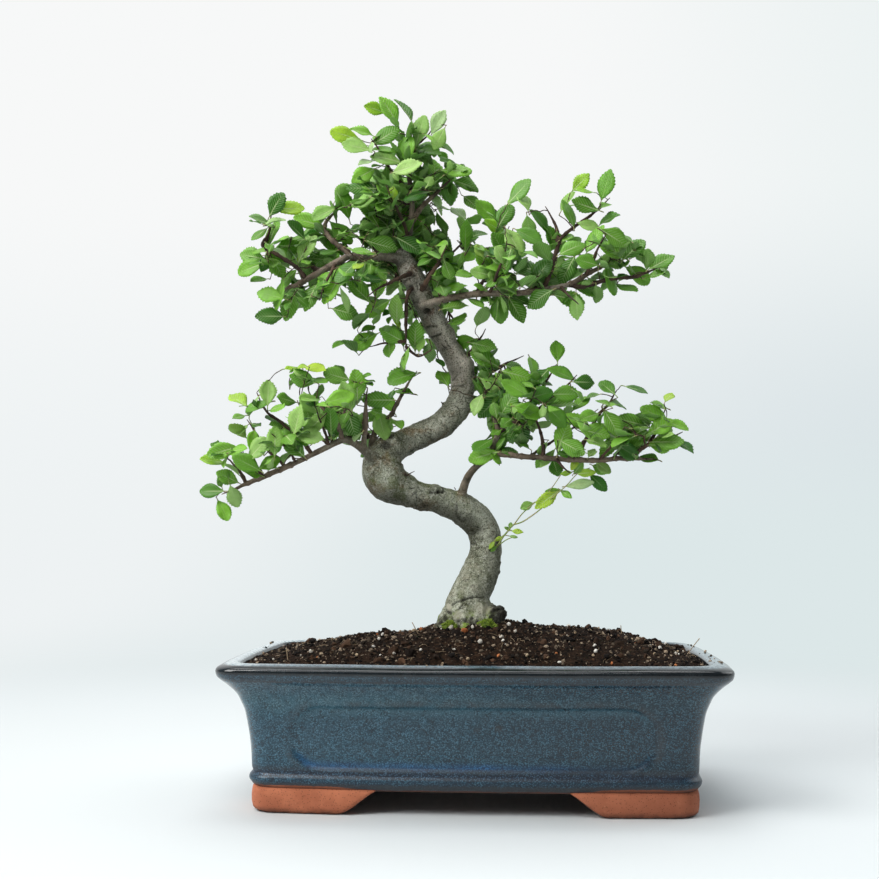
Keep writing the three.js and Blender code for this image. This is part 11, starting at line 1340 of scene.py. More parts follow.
        (-61.9, 28, 391.3, -62.1, 26, 391.1, -0.09, -0.99, -0.1, 0.37, -0.13, 0.92, 11.6, 6.4, 0, 2),
        (-47.1, 27.8, 391, -48.3, 29.4, 390.6, -0.61, 0.77, -0.19, 0.32, 0.46, 0.83, 7.6, 4.1, 0, 2),
        (-51, 28.7, 390.5, -51.9, 27.4, 390.1, -0.58, -0.78, -0.23, 0.06, -0.33, 0.94, 9.9, 6, 0, 2),
        (-15.3, 15.8, 404.6, -13.5, 15.6, 403.4, 0.81, -0.06, -0.58, 0.56, -0.16, 0.81, 12.4, 6.3, 0, 2),
        (-48, 21.7, 399.2, -49.2, 22.1, 400.4, -0.71, 0.23, 0.67, 0.29, -0.77, 0.57, 10.2, 5.4, 0, 2),
        (-18.3, 16.9, 408.2, -19.5, 16.9, 407.6, -0.89, 0.03, -0.46, -0.45, -0.24, 0.86, 10.3, 5, 3, 2),
        (-29.7, 10, 391.6, -30.4, 10.9, 392.1, -0.59, 0.7, 0.4, -0.12, -0.57, 0.81, 6.5, 3.3, 0, 2),
        (-28.3, 21.8, 411.2, -28.9, 23, 410.7, -0.43, 0.84, -0.34, 0.38, 0.51, 0.78, 7.2, 3.6, 0, 2),
        (-49.4, 26.6, 370, -50.2, 25.3, 371.5, -0.38, -0.61, 0.7, 0.89, -0.04, 0.45, 8.6, 5, 0, 2),
        (-13.4, 16.6, 401.1, -13.2, 14.9, 401.4, 0.17, -0.98, 0.14, -0.08, 0.13, 0.99, 11.1, 6.1, 0, 2),
        (-58.3, 32.1, 395.2, -59.5, 32.1, 395.7, -0.91, 0.04, 0.41, 0.35, -0.43, 0.83, 7.2, 3.9, 0, 2),
        (-57.3, 32.7, 390.9, -56.2, 33.7, 391.3, 0.75, 0.62, 0.26, 0.1, -0.49, 0.87, 7.8, 4, 0, 2),
        (-45.2, 52.7, 402.4, -43.6, 51.8, 403.5, 0.77, -0.39, 0.5, -0.63, -0.42, 0.65, 12.4, 6.6, 0, 2),
        (-53, 34.9, 370.9, -51.7, 33.9, 371.9, 0.71, -0.5, 0.5, -0.62, -0.08, 0.78, 10.2, 6.1, 0, 2),
        (-64, 41.9, 392.4, -63, 43.4, 393, 0.52, 0.78, 0.35, -0.1, -0.36, 0.93, 7.7, 3.8, 0, 2),
        (-37.1, 36.7, 375.3, -36.2, 38.2, 374.9, 0.49, 0.84, -0.23, 0.47, -0.03, 0.88, 12.4, 6.5, 0, 2),
        (-38.8, 32.4, 396.6, -38, 30.7, 396.5, 0.44, -0.9, -0.05, -0.55, -0.31, 0.78, 11.5, 7, 0, 2),
        (-27.3, 19.2, 398.2, -25.6, 20.2, 399, 0.81, 0.44, 0.38, -0.01, -0.64, 0.77, 9.2, 5.5, 0, 2),
        (-35.4, 39.9, 389.3, -35.3, 40.4, 387.5, 0.05, 0.3, -0.95, -0.36, 0.89, 0.26, 7.5, 4.6, 0, 2),
        (-38, 33.3, 393.2, -38.1, 34.2, 394.5, -0.11, 0.55, 0.83, -0.55, -0.73, 0.41, 10.7, 6.2, 0, 2),
        (-66.3, 12, 401.6, -65.2, 13.2, 401.8, 0.69, 0.72, 0.11, -0.04, -0.12, 0.99, 7.6, 4.7, 0, 2),
        (-33.7, 15.9, 369.4, -33.3, 14.7, 370.3, 0.26, -0.76, 0.59, -0.32, 0.51, 0.8, 12.3, 7.5, 0, 2),
        (-45.1, 1.1, 393.4, -43.7, 1.8, 392.9, 0.87, 0.4, -0.3, 0.41, -0.23, 0.88, 8.6, 5, 0, 2),
        (-37.1, 12.6, 418.9, -37.6, 13.4, 417.2, -0.27, 0.37, -0.89, -0.63, -0.77, -0.13, 12.7, 7.6, 0, 2),
        (-50.2, 3.4, 397.9, -48.9, 4.8, 398.7, 0.62, 0.69, 0.37, -0.02, -0.46, 0.89, 9.3, 4.7, 0, 2),
        (-46, 14.6, 404.4, -45.2, 15.1, 403.6, 0.64, 0.36, -0.67, 0.57, 0.36, 0.74, 10.7, 5.9, 0, 2),
        (-37.3, 30, 405.1, -36, 29.4, 404.7, 0.87, -0.42, -0.25, 0.2, -0.17, 0.97, 11.6, 6.5, 0, 2),
        (-37.6, 30.3, 404.2, -36.8, 28.5, 404.4, 0.38, -0.91, 0.13, -0.3, 0.01, 0.95, 8.4, 5.2, 3, 2),
        (-62, 37.4, 389.9, -60.7, 38.6, 390, 0.76, 0.65, 0.07, -0.08, -0.01, 1, 8.7, 5.4, 0, 2),
    ]),
    ("shoot_crown_3", [
        (-29.4, 67.6, 372.5, -31.1, 66.8, 373.6, -0.86, -0.4, 0.31, -0.02, 0.63, 0.77, 17.9, 10.3, 0, 0),
        (-40.1, 63.6, 377.9, -40.4, 65.5, 378.6, -0.15, 0.98, 0.15, -0.04, -0.16, 0.99, 17.4, 9.1, 0, 0),
        (-49.2, 55.4, 391.1, -49.3, 57.4, 391.5, -0.04, 1, 0, -0.45, -0.01, 0.89, 16.9, 8.9, 0, 0),
        (-58.3, 38.6, 388.6, -57.6, 40.2, 388, 0.36, 0.8, -0.48, 0.15, 0.45, 0.88, 19.5, 10.4, 0, 0),
        (-59.5, 54.8, 413.4, -58.6, 56.4, 414.4, 0.49, 0.82, 0.3, -0.36, -0.13, 0.93, 12.6, 6.5, 0, 0),
        (-54.5, 71.5, 390.4, -55.2, 73.3, 391.3, -0.34, 0.9, 0.26, -0.45, -0.4, 0.8, 15.2, 8.7, 0, 0),
        (-44.2, 61.3, 389.7, -45.5, 61.5, 391.6, -0.63, 0.13, 0.76, 0.76, 0.29, 0.58, 14.4, 8.2, 0, 0),
        (-44.6, 58.8, 389.5, -45.9, 60.2, 390.1, -0.68, 0.72, 0.13, 0.52, 0.36, 0.77, 18.5, 10.6, 0, 0),
        (-52.8, 70.2, 410.3, -54.5, 69.7, 411.7, -0.84, -0.25, 0.49, -0.04, 0.91, 0.4, 15, 8.4, 0, 0),
        (-67.3, 40.1, 387.2, -67, 42, 387.7, 0.17, 0.98, 0.05, 0.09, -0.07, 0.99, 13.1, 7, 0, 0),
        (-53.4, 57.9, 364.8, -52.3, 59.1, 366.4, 0.54, 0.6, 0.6, -0.55, -0.29, 0.78, 19.1, 9.9, 0, 0),
        (-61.4, 60.2, 355.3, -61.2, 62.2, 356.1, 0.08, 0.98, 0.2, 0.4, -0.21, 0.89, 16.5, 8.4, 0, 0),
        (-42.4, 54.6, 381.5, -44.3, 55, 381.8, -0.98, 0.18, -0.04, 0.05, 0.46, 0.88, 19.4, 11, 0, 0),
        (-58.2, 69.9, 387.7, -58.7, 71.7, 388.9, -0.26, 0.88, 0.39, 0.88, 0.05, 0.47, 14.2, 8.4, 0, 0),
        (-46.5, 66.1, 386.2, -47, 68, 386.2, -0.23, 0.95, -0.21, 0.17, 0.25, 0.95, 14.6, 7.1, 0, 0),
        (-49.1, 69.6, 389.4, -48.5, 68.2, 388.5, 0.3, -0.71, -0.64, 0.13, -0.63, 0.76, 15.5, 8.2, 0, 0),
        (-68.3, 58.3, 382.8, -67.8, 60.1, 382.5, 0.23, 0.91, -0.36, 0.05, 0.36, 0.93, 13.2, 7.1, 0, 0),
        (-53, 59.1, 370.9, -54.1, 60.3, 372.5, -0.58, 0.57, 0.58, 0.57, 0.79, -0.21, 15.4, 8, 0, 0),
        (-53.9, 61, 393.7, -53.3, 62.9, 393.9, 0.26, 0.96, -0.12, 0.11, 0.09, 0.99, 13, 7, 0, 0),
        (-43.5, 66.3, 363.6, -44.3, 65.3, 365.6, -0.39, -0.51, 0.77, -0.29, 0.86, 0.43, 18.2, 9.4, 0, 0),
        (-49.4, 47.2, 393.7, -50.4, 48.8, 393.9, -0.54, 0.83, -0.13, -0.26, -0.01, 0.96, 13.3, 6.8, 0, 0),
        (-60.3, 54.1, 366.5, -60.3, 56.1, 367.2, -0.04, 0.99, 0.15, -0.41, -0.16, 0.9, 16.9, 9.6, 0, 0),
        (-62.9, 69.6, 370.1, -61.6, 70.4, 371.7, 0.68, 0.42, 0.6, -0.52, -0.3, 0.8, 15.2, 8, 0, 0),
        (-71.7, 48.9, 397, -72.3, 50.8, 397.3, -0.3, 0.95, -0.04, 0.67, 0.24, 0.7, 14.5, 8.5, 0, 0),
        (-76.3, 56.8, 377, -74.4, 57.3, 377.8, 0.95, 0.24, 0.21, -0.27, 0.27, 0.92, 15.2, 7.9, 0, 0),
        (-42.3, 64.5, 372.6, -43.9, 65.4, 373.6, -0.83, 0.44, 0.34, 0.56, 0.69, 0.45, 19, 9.9, 0, 0),
        (-72.8, 48.9, 399.4, -72.8, 50.8, 400.4, -0.03, 0.96, 0.28, -0.22, -0.28, 0.93, 17.6, 9.4, 3, 0),
        (-59.1, 54.1, 369.5, -60.3, 55.4, 370.8, -0.64, 0.63, 0.44, 0.43, -0.19, 0.88, 19.3, 10.9, 0, 0),
        (-27.8, 50.2, 376.1, -28.3, 52.1, 376.9, -0.24, 0.95, 0.2, 0.26, -0.13, 0.96, 15.5, 8.1, 0, 0),
        (-45.5, 67.1, 361.8, -47.5, 67.2, 361.9, -0.98, 0.05, -0.19, -0.18, 0.16, 0.97, 17, 8.7, 0, 0),
        (-57, 68.9, 398.9, -57.4, 70.7, 398.7, -0.23, 0.92, -0.33, 0.17, 0.37, 0.92, 16.4, 9.6, 0, 0),
        (-45, 54.7, 372.4, -44.9, 56.6, 372.3, 0.01, 0.96, -0.28, 0.4, 0.25, 0.88, 18.4, 11, 3, 0),
        (-59.4, 67.4, 386.9, -59.1, 69.1, 386.5, 0.16, 0.89, -0.43, -0.4, 0.46, 0.79, 17.8, 10.5, 0, 0),
        (-56.7, 48.5, 383.4, -56.1, 50.4, 383.3, 0.29, 0.93, -0.25, 0.79, -0.08, 0.61, 14.3, 6.9, 3, 0),
        (-62.5, 44.7, 392.9, -62.5, 45.6, 391.5, -0.01, 0.46, -0.89, -0.11, 0.88, 0.46, 18.8, 9.7, 0, 0),
        (-47, 52.2, 381.6, -47.5, 54.1, 382.5, -0.27, 0.93, 0.24, 0.55, -0.05, 0.84, 16.3, 8, 0, 0),
        (-67.2, 57.4, 389.7, -66.7, 59.3, 389.8, 0.29, 0.94, -0.16, -0.18, 0.22, 0.96, 17.9, 9.7, 3, 0),
        (-72.9, 66.7, 402.2, -72.5, 68.5, 401.7, 0.19, 0.86, -0.47, 0.16, 0.45, 0.88, 13, 7.2, 0, 0),
        (-75.9, 45.7, 401.3, -76.7, 47.5, 401.5, -0.39, 0.92, -0.09, 0.06, 0.13, 0.99, 16.3, 8.9, 0, 0),
        (-62.4, 74.3, 352.7, -60.9, 75.2, 354, 0.79, 0.44, 0.43, -0.2, -0.47, 0.86, 14.1, 7.8, 0, 0),
        (-73.6, 57.1, 377.3, -73.1, 59, 377.4, 0.22, 0.96, -0.18, 0.21, 0.13, 0.97, 18.9, 9.4, 0, 0),
        (-69.1, 69.4, 377.3, -70.6, 70.8, 377.7, -0.71, 0.7, -0.01, -0.05, -0.03, 1, 13.4, 8, 0, 0),
        (-35, 66.2, 385.4, -36.4, 65, 386.5, -0.69, -0.61, 0.38, 0.23, 0.31, 0.92, 18.6, 9.3, 0, 0),
        (-58.3, 67.3, 368, -59.4, 67.7, 370, -0.57, 0.2, 0.8, 0.77, 0.48, 0.42, 17.3, 8.6, 0, 0),
        (-75.2, 64.1, 388.1, -74.8, 65.4, 389.9, 0.17, 0.67, 0.72, -0.43, -0.61, 0.67, 15.6, 8.5, 0, 0),
        (-61.8, 70.1, 417.1, -61.7, 70.4, 415.5, 0.07, 0.18, -0.98, -0.34, 0.93, 0.15, 12.8, 6.3, 0, 0),
        (-68.4, 68.8, 384, -68.3, 70.7, 384.9, 0.08, 0.97, 0.25, -0.59, -0.15, 0.79, 17.8, 10.5, 0, 0),
        (-63.5, 73.8, 372.7, -65.3, 74.5, 373.3, -0.92, 0.36, 0.14, 0.16, 0, 0.99, 18.5, 9.6, 0, 0),
        (-76, 47, 384.1, -75.5, 47.1, 382.5, 0.24, 0.05, -0.97, 0.72, 0.66, 0.21, 17.2, 10.3, 3, 0),
        (-72.3, 71.8, 386, -72.2, 73.6, 387.3, 0.06, 0.89, 0.45, -0.58, -0.34, 0.74, 16.4, 9.4, 0, 0),
        (-44.6, 72.9, 387.4, -46.2, 74, 387.9, -0.83, 0.56, 0.04, 0.35, 0.46, 0.82, 18.6, 9.6, 0, 0),
        (-71.4, 54.8, 378, -70.9, 56.7, 378.7, 0.23, 0.96, 0.13, -0.72, 0.08, 0.69, 14.3, 8.3, 0, 0),
        (-65.8, 56.1, 367.4, -66.3, 58, 368, -0.29, 0.95, 0.13, 0.23, -0.06, 0.97, 14.6, 8, 0, 0),
        (-63.3, 56.9, 399.6, -61.8, 58.2, 399.9, 0.75, 0.66, -0.03, -0.5, 0.6, 0.62, 19.2, 10.2, 0, 0),
        (-82.8, 68.7, 385, -82.2, 70, 386.8, 0.25, 0.66, 0.71, 0.14, 0.7, -0.7, 14.2, 8, 3, 0),
        (-78.6, 48.3, 387.7, -78.6, 50.2, 388.4, 0.02, 0.99, 0.17, -0.21, -0.16, 0.96, 14, 7.6, 0, 0),
        (-41.7, 57.7, 408, -43.1, 59.1, 408.2, -0.71, 0.7, -0.07, 0.06, 0.16, 0.99, 18.2, 8.9, 0, 0),
        (-54.3, 70.2, 407.5, -55.6, 69.8, 409.2, -0.6, -0.19, 0.78, 0.63, 0.48, 0.6, 9.2, 4.8, 3, 2),
        (-72, 71.6, 385.9, -72, 71.4, 387.3, 0.03, -0.13, 0.99, -0.31, -0.94, -0.12, 12.4, 6.7, 1, 2),
        (-64.3, 60.2, 384.3, -64.2, 58.2, 384, 0.06, -0.98, -0.17, -0.43, -0.18, 0.89, 9, 5.1, 0, 2),
        (-74.5, 57, 377.2, -75.2, 58, 377.3, -0.55, 0.83, 0.11, 0.38, 0.13, 0.91, 12.1, 7, 0, 2),
        (-67.5, 40.2, 387.1, -67, 41.9, 387.9, 0.25, 0.88, 0.4, 0.25, -0.46, 0.85, 11.3, 5.4, 0, 2),
        (-61.8, 69, 369.6, -60, 69.3, 370.2, 0.94, 0.15, 0.29, -0.15, -0.58, 0.8, 10.4, 6, 0, 2),
        (-71.7, 48.9, 397, -72.7, 48, 397.7, -0.66, -0.6, 0.46, -0.19, 0.72, 0.67, 7.1, 3.7, 0, 2),
        (-77.8, 47.9, 386.5, -78.8, 46.9, 388.1, -0.47, -0.46, 0.75, 0.7, 0.31, 0.64, 11.6, 6.1, 1, 2),
        (-58.5, 69.4, 387.6, -57.4, 70.1, 387.7, 0.83, 0.55, 0.12, -0.17, 0.03, 0.99, 8.7, 4.5, 0, 2),
        (-58.2, 69.9, 415.2, -59.7, 70.6, 413.8, -0.7, 0.33, -0.63, -0.57, 0.27, 0.77, 11, 5.4, 0, 2),
        (-65.6, 59.4, 389.5, -65.7, 58.7, 390.9, -0.07, -0.45, 0.89, 0.89, 0.37, 0.26, 7.9, 4, 0, 2),
        (-34.4, 65.3, 374.4, -33.6, 65.1, 375.7, 0.54, -0.08, 0.84, -0.67, 0.55, 0.49, 9.8, 4.9, 0, 2),
        (-37.5, 62.8, 374.8, -35.5, 62.7, 374.4, 0.97, -0.02, -0.22, 0.15, -0.68, 0.71, 10.2, 5.8, 3, 2),
        (-68.8, 65.5, 387.5, -69.2, 64.4, 389.2, -0.18, -0.53, 0.83, 0.93, 0.17, 0.31, 9.1, 5.4, 0, 2),
        (-68.2, 68.5, 384.3, -69.1, 67.1, 383.1, -0.44, -0.71, -0.54, -0.06, -0.58, 0.81, 6.7, 3.3, 0, 2),
        (-54.8, 70.6, 413.6, -53.9, 71.1, 414.6, 0.64, 0.37, 0.67, -0.02, -0.87, 0.49, 10.2, 5.5, 0, 2),
        (-60, 54.2, 366.4, -59.1, 55.8, 367.6, 0.42, 0.73, 0.54, -0.68, -0.14, 0.72, 11.8, 6.2, 0, 2),
        (-68.9, 46.7, 395.2, -69.1, 48.8, 395.1, -0.11, 0.99, -0.06, -0.53, -0.01, 0.85, 9.2, 4.7, 0, 2),
        (-62.7, 39.5, 390.9, -63.8, 39.9, 391.3, -0.9, 0.29, 0.33, 0.1, -0.6, 0.8, 7.4, 4.6, 0, 2),
        (-67.8, 68.2, 397.8, -67.9, 67.1, 398.9, -0.09, -0.7, 0.71, 0.02, 0.71, 0.7, 10.8, 6.5, 0, 2),
        (-43.9, 57.3, 387, -45, 57.8, 385.7, -0.63, 0.31, -0.71, -0.78, -0.23, 0.58, 7.3, 3.6, 0, 2),
        (-81.7, 68.3, 385.3, -82.7, 67, 385.5, -0.59, -0.8, 0.09, 0.31, -0.12, 0.94, 10.9, 6.7, 0, 2),
        (-62.8, 63.7, 388.7, -62.4, 65, 389.4, 0.27, 0.86, 0.43, -0.24, -0.37, 0.9, 8.9, 5, 0, 2),
        (-41.9, 58.2, 374.6, -42.3, 59.5, 375.6, -0.19, 0.75, 0.63, -0.21, -0.66, 0.72, 10, 5, 0, 2),
        (-68.8, 57.7, 382, -67.7, 57.4, 381.1, 0.73, -0.2, -0.65, 0.31, -0.76, 0.58, 8, 4.7, 0, 2),
        (-54.3, 49.3, 371.9, -54.2, 50.6, 373, 0.03, 0.76, 0.65, 0.26, -0.64, 0.73, 12.8, 7.2, 0, 2),
        (-41.7, 63, 373.7, -41.6, 63.1, 372.4, 0.1, 0.08, -0.99, -0.31, -0.95, -0.1, 12.7, 6.4, 0, 2),
        (-61.4, 64.8, 388.2, -59.7, 65.2, 389, 0.89, 0.22, 0.41, -0.41, 0.79, 0.46, 11.1, 5.5, 0, 2),
        (-62.6, 44.1, 392.7, -64.1, 45.4, 393.2, -0.73, 0.62, 0.28, 0.08, -0.33, 0.94, 10.8, 5.7, 0, 2),
        (-63.3, 54.1, 397.6, -63, 55.5, 397.3, 0.21, 0.96, -0.2, -0.33, 0.26, 0.91, 11.8, 6.8, 0, 2),
        (-58.6, 38.7, 388, -60, 40.3, 388.2, -0.67, 0.73, 0.13, 0.09, -0.1, 0.99, 6.5, 3.9, 0, 2),
        (-38.3, 64.9, 380.5, -38.3, 64.3, 382.5, 0.01, -0.29, 0.96, 0.25, 0.93, 0.28, 12, 6.1, 0, 2),
        (-69.1, 69.4, 377.5, -69.1, 71.1, 376.9, 0.02, 0.94, -0.34, -0.2, 0.34, 0.92, 12.6, 6.1, 0, 2),
        (-56.6, 67.3, 397.7, -57.4, 67, 398.8, -0.6, -0.2, 0.77, 0.56, 0.59, 0.59, 12.8, 6.4, 1, 2),
        (-74.4, 47.2, 400.4, -75.8, 47.9, 399.8, -0.84, 0.41, -0.36, -0.49, -0.29, 0.82, 9.4, 5.2, 3, 2),
        (-41.9, 57.2, 407.3, -43.4, 57.6, 408.7, -0.71, 0.21, 0.67, 0.62, -0.27, 0.74, 8.2, 4.3, 3, 2),
        (-40.4, 61.6, 376.7, -41.5, 63, 376.7, -0.61, 0.79, 0.02, -0.28, -0.24, 0.93, 9.7, 5.5, 0, 2),
        (-57.1, 51.2, 380.9, -58.8, 50.4, 381.8, -0.81, -0.39, 0.44, 0.32, 0.33, 0.89, 9.4, 5.5, 3, 2),
        (-63.1, 56.8, 401.3, -63.6, 57.6, 402.2, -0.4, 0.59, 0.7, 0.26, -0.66, 0.7, 11, 5.9, 0, 2),
        (-47.1, 71.1, 388.5, -46.9, 73, 388.2, 0.09, 0.99, -0.14, -0.04, 0.14, 0.99, 12.2, 5.9, 0, 2),
        (-60.3, 55.9, 411.2, -59, 54.6, 411.4, 0.72, -0.69, 0.09, -0.54, -0.47, 0.7, 10.7, 5.6, 0, 2),
        (-79.2, 67.6, 386, -79.9, 69.2, 387.1, -0.35, 0.77, 0.53, 0.08, -0.54, 0.84, 11.6, 6.2, 3, 2),
        (-46.4, 66, 386.3, -45.3, 66.1, 387.1, 0.83, 0.12, 0.55, -0.45, -0.43, 0.78, 8.3, 4.3, 0, 2),
        (-74.8, 46.1, 384.5, -75.1, 47, 385.6, -0.18, 0.61, 0.77, 0.07, -0.77, 0.63, 11.7, 6, 0, 2),
        (-73, 56.4, 377.5, -74.4, 56.6, 378.2, -0.91, 0.11, 0.4, 0.15, -0.82, 0.56, 6.6, 3.3, 0, 2),
        (-65.7, 56.1, 367.4, -66.7, 57.6, 367.5, -0.55, 0.83, 0.07, 0.78, 0.48, 0.4, 9.1, 4.4, 3, 2),
        (-68.4, 68.8, 384, -69.6, 68, 385.2, -0.63, -0.44, 0.64, 0.37, 0.55, 0.75, 7.7, 4, 0, 2),
        (-75.9, 56.9, 377.1, -76.8, 55.7, 377.5, -0.6, -0.74, 0.3, 0.44, 0.01, 0.9, 7.3, 4.3, 0, 2),
        (-63.2, 69.8, 370.7, -62.6, 68.2, 370.3, 0.34, -0.92, -0.2, 0.25, -0.12, 0.96, 10.1, 5.1, 0, 2),
        (-58.6, 69.1, 387.5, -59.4, 70.7, 387.1, -0.45, 0.87, -0.2, -0.32, 0.05, 0.95, 10.2, 5.8, 0, 2),
        (-61, 70, 416.6, -62.3, 71.6, 416, -0.59, 0.75, -0.3, -0.45, 0.01, 0.89, 9.1, 5.4, 0, 2),
        (-66.3, 58.6, 389.6, -67.9, 58.5, 389.9, -0.98, 0, 0.18, 0.18, -0.06, 0.98, 11.2, 5.4, 0, 2),
        (-34.5, 65.2, 374.4, -33.6, 65.2, 373.3, 0.59, 0.05, -0.81, 0.8, -0.1, 0.59, 12.9, 6.6, 0, 2),
        (-39.6, 61.1, 375.5, -39.9, 62.7, 375, -0.19, 0.95, -0.24, 0.2, 0.28, 0.94, 9.3, 5.5, 0, 2),
        (-53.6, 70.3, 411.6, -54.2, 71.7, 411.8, -0.41, 0.9, 0.12, 0.17, -0.06, 0.98, 7, 3.6, 0, 2),
        (-57.1, 55.6, 365.2, -57, 56.8, 365.4, 0.01, 0.98, 0.19, 0.16, -0.19, 0.97, 9, 4.6, 0, 2),
        (-55.7, 71, 389.6, -54.5, 70.7, 388.9, 0.84, -0.23, -0.49, 0.54, 0.39, 0.74, 8.5, 5.1, 0, 2),
        (-53.1, 58.6, 368.5, -52.4, 58.4, 370, 0.46, -0.15, 0.87, -0.72, -0.65, 0.26, 6.9, 4, 0, 2),
        (-46.9, 66.6, 386.7, -48.3, 66, 385.8, -0.77, -0.38, -0.52, 0.41, -0.91, 0.05, 6.8, 3.3, 3, 2),
    ]),
    ("shoot_crown_4", [
        (-62.3, -9.7, 391.5, -64.2, -10.3, 391.9, -0.97, -0.26, -0.02, 0.24, -0.9, 0.36, 22.2, 12.1, 0, 1),
        (-54.1, 10.1, 360.9, -55, 9.5, 362.9, -0.47, -0.3, 0.83, 0.28, -0.94, -0.18, 22.7, 11.2, 0, 1),
        (-62.8, -10.3, 364.8, -63.8, -10.1, 367, -0.5, 0.09, 0.86, 0.46, -0.82, 0.35, 22.3, 13.2, 0, 1),
        (-66.9, -12.6, 348.9, -67.5, -12.4, 351.2, -0.26, 0.1, 0.96, 0.15, -0.98, 0.14, 22.2, 11, 0, 1),
        (-54.5, 13.3, 378.3, -55.4, 12.7, 380.4, -0.47, -0.3, 0.83, 0.28, -0.94, -0.18, 22.8, 11.3, 0, 1),
        (-83, -5.2, 369.7, -83.5, -5.8, 371.9, -0.24, -0.29, 0.93, 0.47, -0.87, -0.16, 22.4, 11.8, 0, 1),
        (-64, -10.1, 406.1, -65.7, -10.5, 405.5, -0.84, -0.21, -0.5, 0.16, -0.98, 0.14, 19.2, 11.4, 0, 1),
        (-85.2, -13.2, 378.8, -83.2, -13.5, 379.7, 0.96, -0.15, 0.24, -0.24, -0.9, 0.38, 22.2, 12.6, 3, 1),
        (-94.4, -6, 383.1, -93.1, -7, 384.7, 0.65, -0.49, 0.58, -0.21, 0.61, 0.76, 15.9, 8.9, 0, 1),
        (-82.3, -13.3, 360.8, -81.3, -11.9, 362.4, 0.47, 0.68, 0.57, 0.13, -0.69, 0.72, 11, 5.5, 0, 1),
        (-38.6, -5.7, 373.4, -40, -5.2, 372.5, -0.71, 0.22, -0.67, -0.51, -0.82, 0.26, 16.7, 8.4, 0, 1),
        (-76.1, -5.2, 364.3, -75.7, -6.1, 363, 0.25, -0.47, -0.85, 0.71, -0.51, 0.49, 14.3, 7.7, 0, 1),
        (-58.7, 0.2, 360.7, -59.8, 1.4, 362.2, -0.57, 0.59, 0.58, 0.38, -0.44, 0.81, 16.3, 9.2, 0, 1),
        (-61.2, -3.3, 394.8, -62.3, -2.1, 396.3, -0.55, 0.61, 0.57, 0.26, -0.52, 0.81, 13.9, 7.8, 0, 1),
        (-75.2, -1.5, 360.5, -76.5, -3, 360.7, -0.68, -0.73, -0.06, 0.41, -0.44, 0.8, 11, 5.8, 0, 1),
        (-64.7, 3.9, 396.5, -65.3, 2.5, 395.5, -0.32, -0.66, -0.68, -0.51, -0.49, 0.71, 11.1, 5.9, 0, 1),
        (-52.4, 2.2, 356.4, -53.4, 0.6, 357.7, -0.46, -0.76, 0.45, 0.36, 0.31, 0.88, 11, 6.5, 0, 1),
        (-92.3, -5.5, 374.6, -91.8, -7, 376.3, 0.24, -0.73, 0.64, -0.7, 0.33, 0.63, 11, 5.4, 0, 1),
        (-68, 4.6, 359.6, -67.7, 5.8, 361.6, 0.15, 0.64, 0.75, -0.73, -0.45, 0.52, 11.2, 6.6, 0, 1),
        (-67.3, 9.2, 386.1, -67.1, 9.7, 384.5, 0.07, 0.29, -0.95, 0.45, 0.84, 0.29, 15.2, 8.4, 0, 0),
        (-41.8, -22.8, 385, -40.2, -23.8, 386.1, 0.81, -0.49, 0.32, -0.25, 0.2, 0.95, 12.6, 7, 0, 0),
        (-70.4, -0.9, 375.8, -68.9, -2.1, 375.7, 0.74, -0.63, -0.26, 0.27, -0.08, 0.96, 19.3, 9.7, 0, 0),
        (-69.1, -19.8, 360.2, -68.4, -21.7, 360.3, 0.31, -0.94, -0.16, 0.06, -0.15, 0.99, 14.6, 7.7, 0, 0),
        (-78.5, -22.8, 360.6, -77.2, -21.3, 361.4, 0.66, 0.71, 0.24, -0.29, -0.06, 0.96, 19, 10.8, 0, 0),
        (-50.9, -33, 385, -52, -34.6, 385.7, -0.55, -0.82, 0.13, 0.15, 0.06, 0.99, 13.7, 7.3, 0, 0),
        (-64.3, -2.7, 366.8, -65.1, -0.9, 366.7, -0.37, 0.89, -0.26, 0.64, 0.45, 0.62, 16.8, 9.2, 0, 0),
        (-68, -2.1, 397.3, -68.9, -3.9, 397.7, -0.46, -0.89, 0, 0.74, -0.38, 0.56, 14.8, 7.9, 0, 0),
        (-50.6, -5.2, 386.4, -50.3, -7.1, 387.1, 0.16, -0.97, 0.18, 0.23, 0.21, 0.95, 17.8, 10.3, 0, 0),
        (-74.2, -4.4, 385.8, -72.7, -5.5, 385.4, 0.74, -0.51, -0.44, 0.27, -0.38, 0.88, 14.6, 7.7, 3, 0),
        (-51.5, -15, 365.4, -51.6, -16.9, 365.3, -0.03, -0.96, -0.26, -0.31, -0.24, 0.92, 12.8, 6.9, 0, 0),
        (-53.8, -20.7, 365.2, -52.9, -22.4, 364.9, 0.44, -0.82, -0.37, 0.7, 0.06, 0.71, 18, 9.6, 0, 0),
        (-53.3, 6.2, 380.9, -53.3, 5.2, 379.6, -0.01, -0.47, -0.88, -0.07, -0.88, 0.47, 16.9, 8.9, 0, 0),
        (-48.9, 3.1, 376.5, -49.7, 4.9, 376.9, -0.39, 0.92, -0.01, 0.26, 0.12, 0.96, 16.6, 8, 0, 0),
        (-59.9, -18, 385.3, -59.4, -19.7, 384.9, 0.25, -0.87, -0.42, -0.1, -0.46, 0.88, 14.6, 8.7, 0, 0),
        (-51.2, 3.3, 375.1, -52.3, 3.8, 377.1, -0.56, 0.26, 0.79, 0.72, -0.33, 0.61, 16.1, 9.4, 3, 0),
        (-58.8, -7.2, 372.9, -57.3, -6.1, 372.7, 0.76, 0.56, -0.31, 0.05, 0.43, 0.9, 15.6, 8, 0, 0),
        (-26.2, -21.6, 385.7, -28.1, -22.1, 385.7, -0.95, -0.24, -0.21, 0.04, -0.73, 0.68, 18.5, 10.5, 0, 0),
        (-66.9, -16.7, 385.4, -66.4, -18.5, 385.4, 0.26, -0.94, -0.22, -0.13, -0.25, 0.96, 16.8, 8.2, 0, 0),
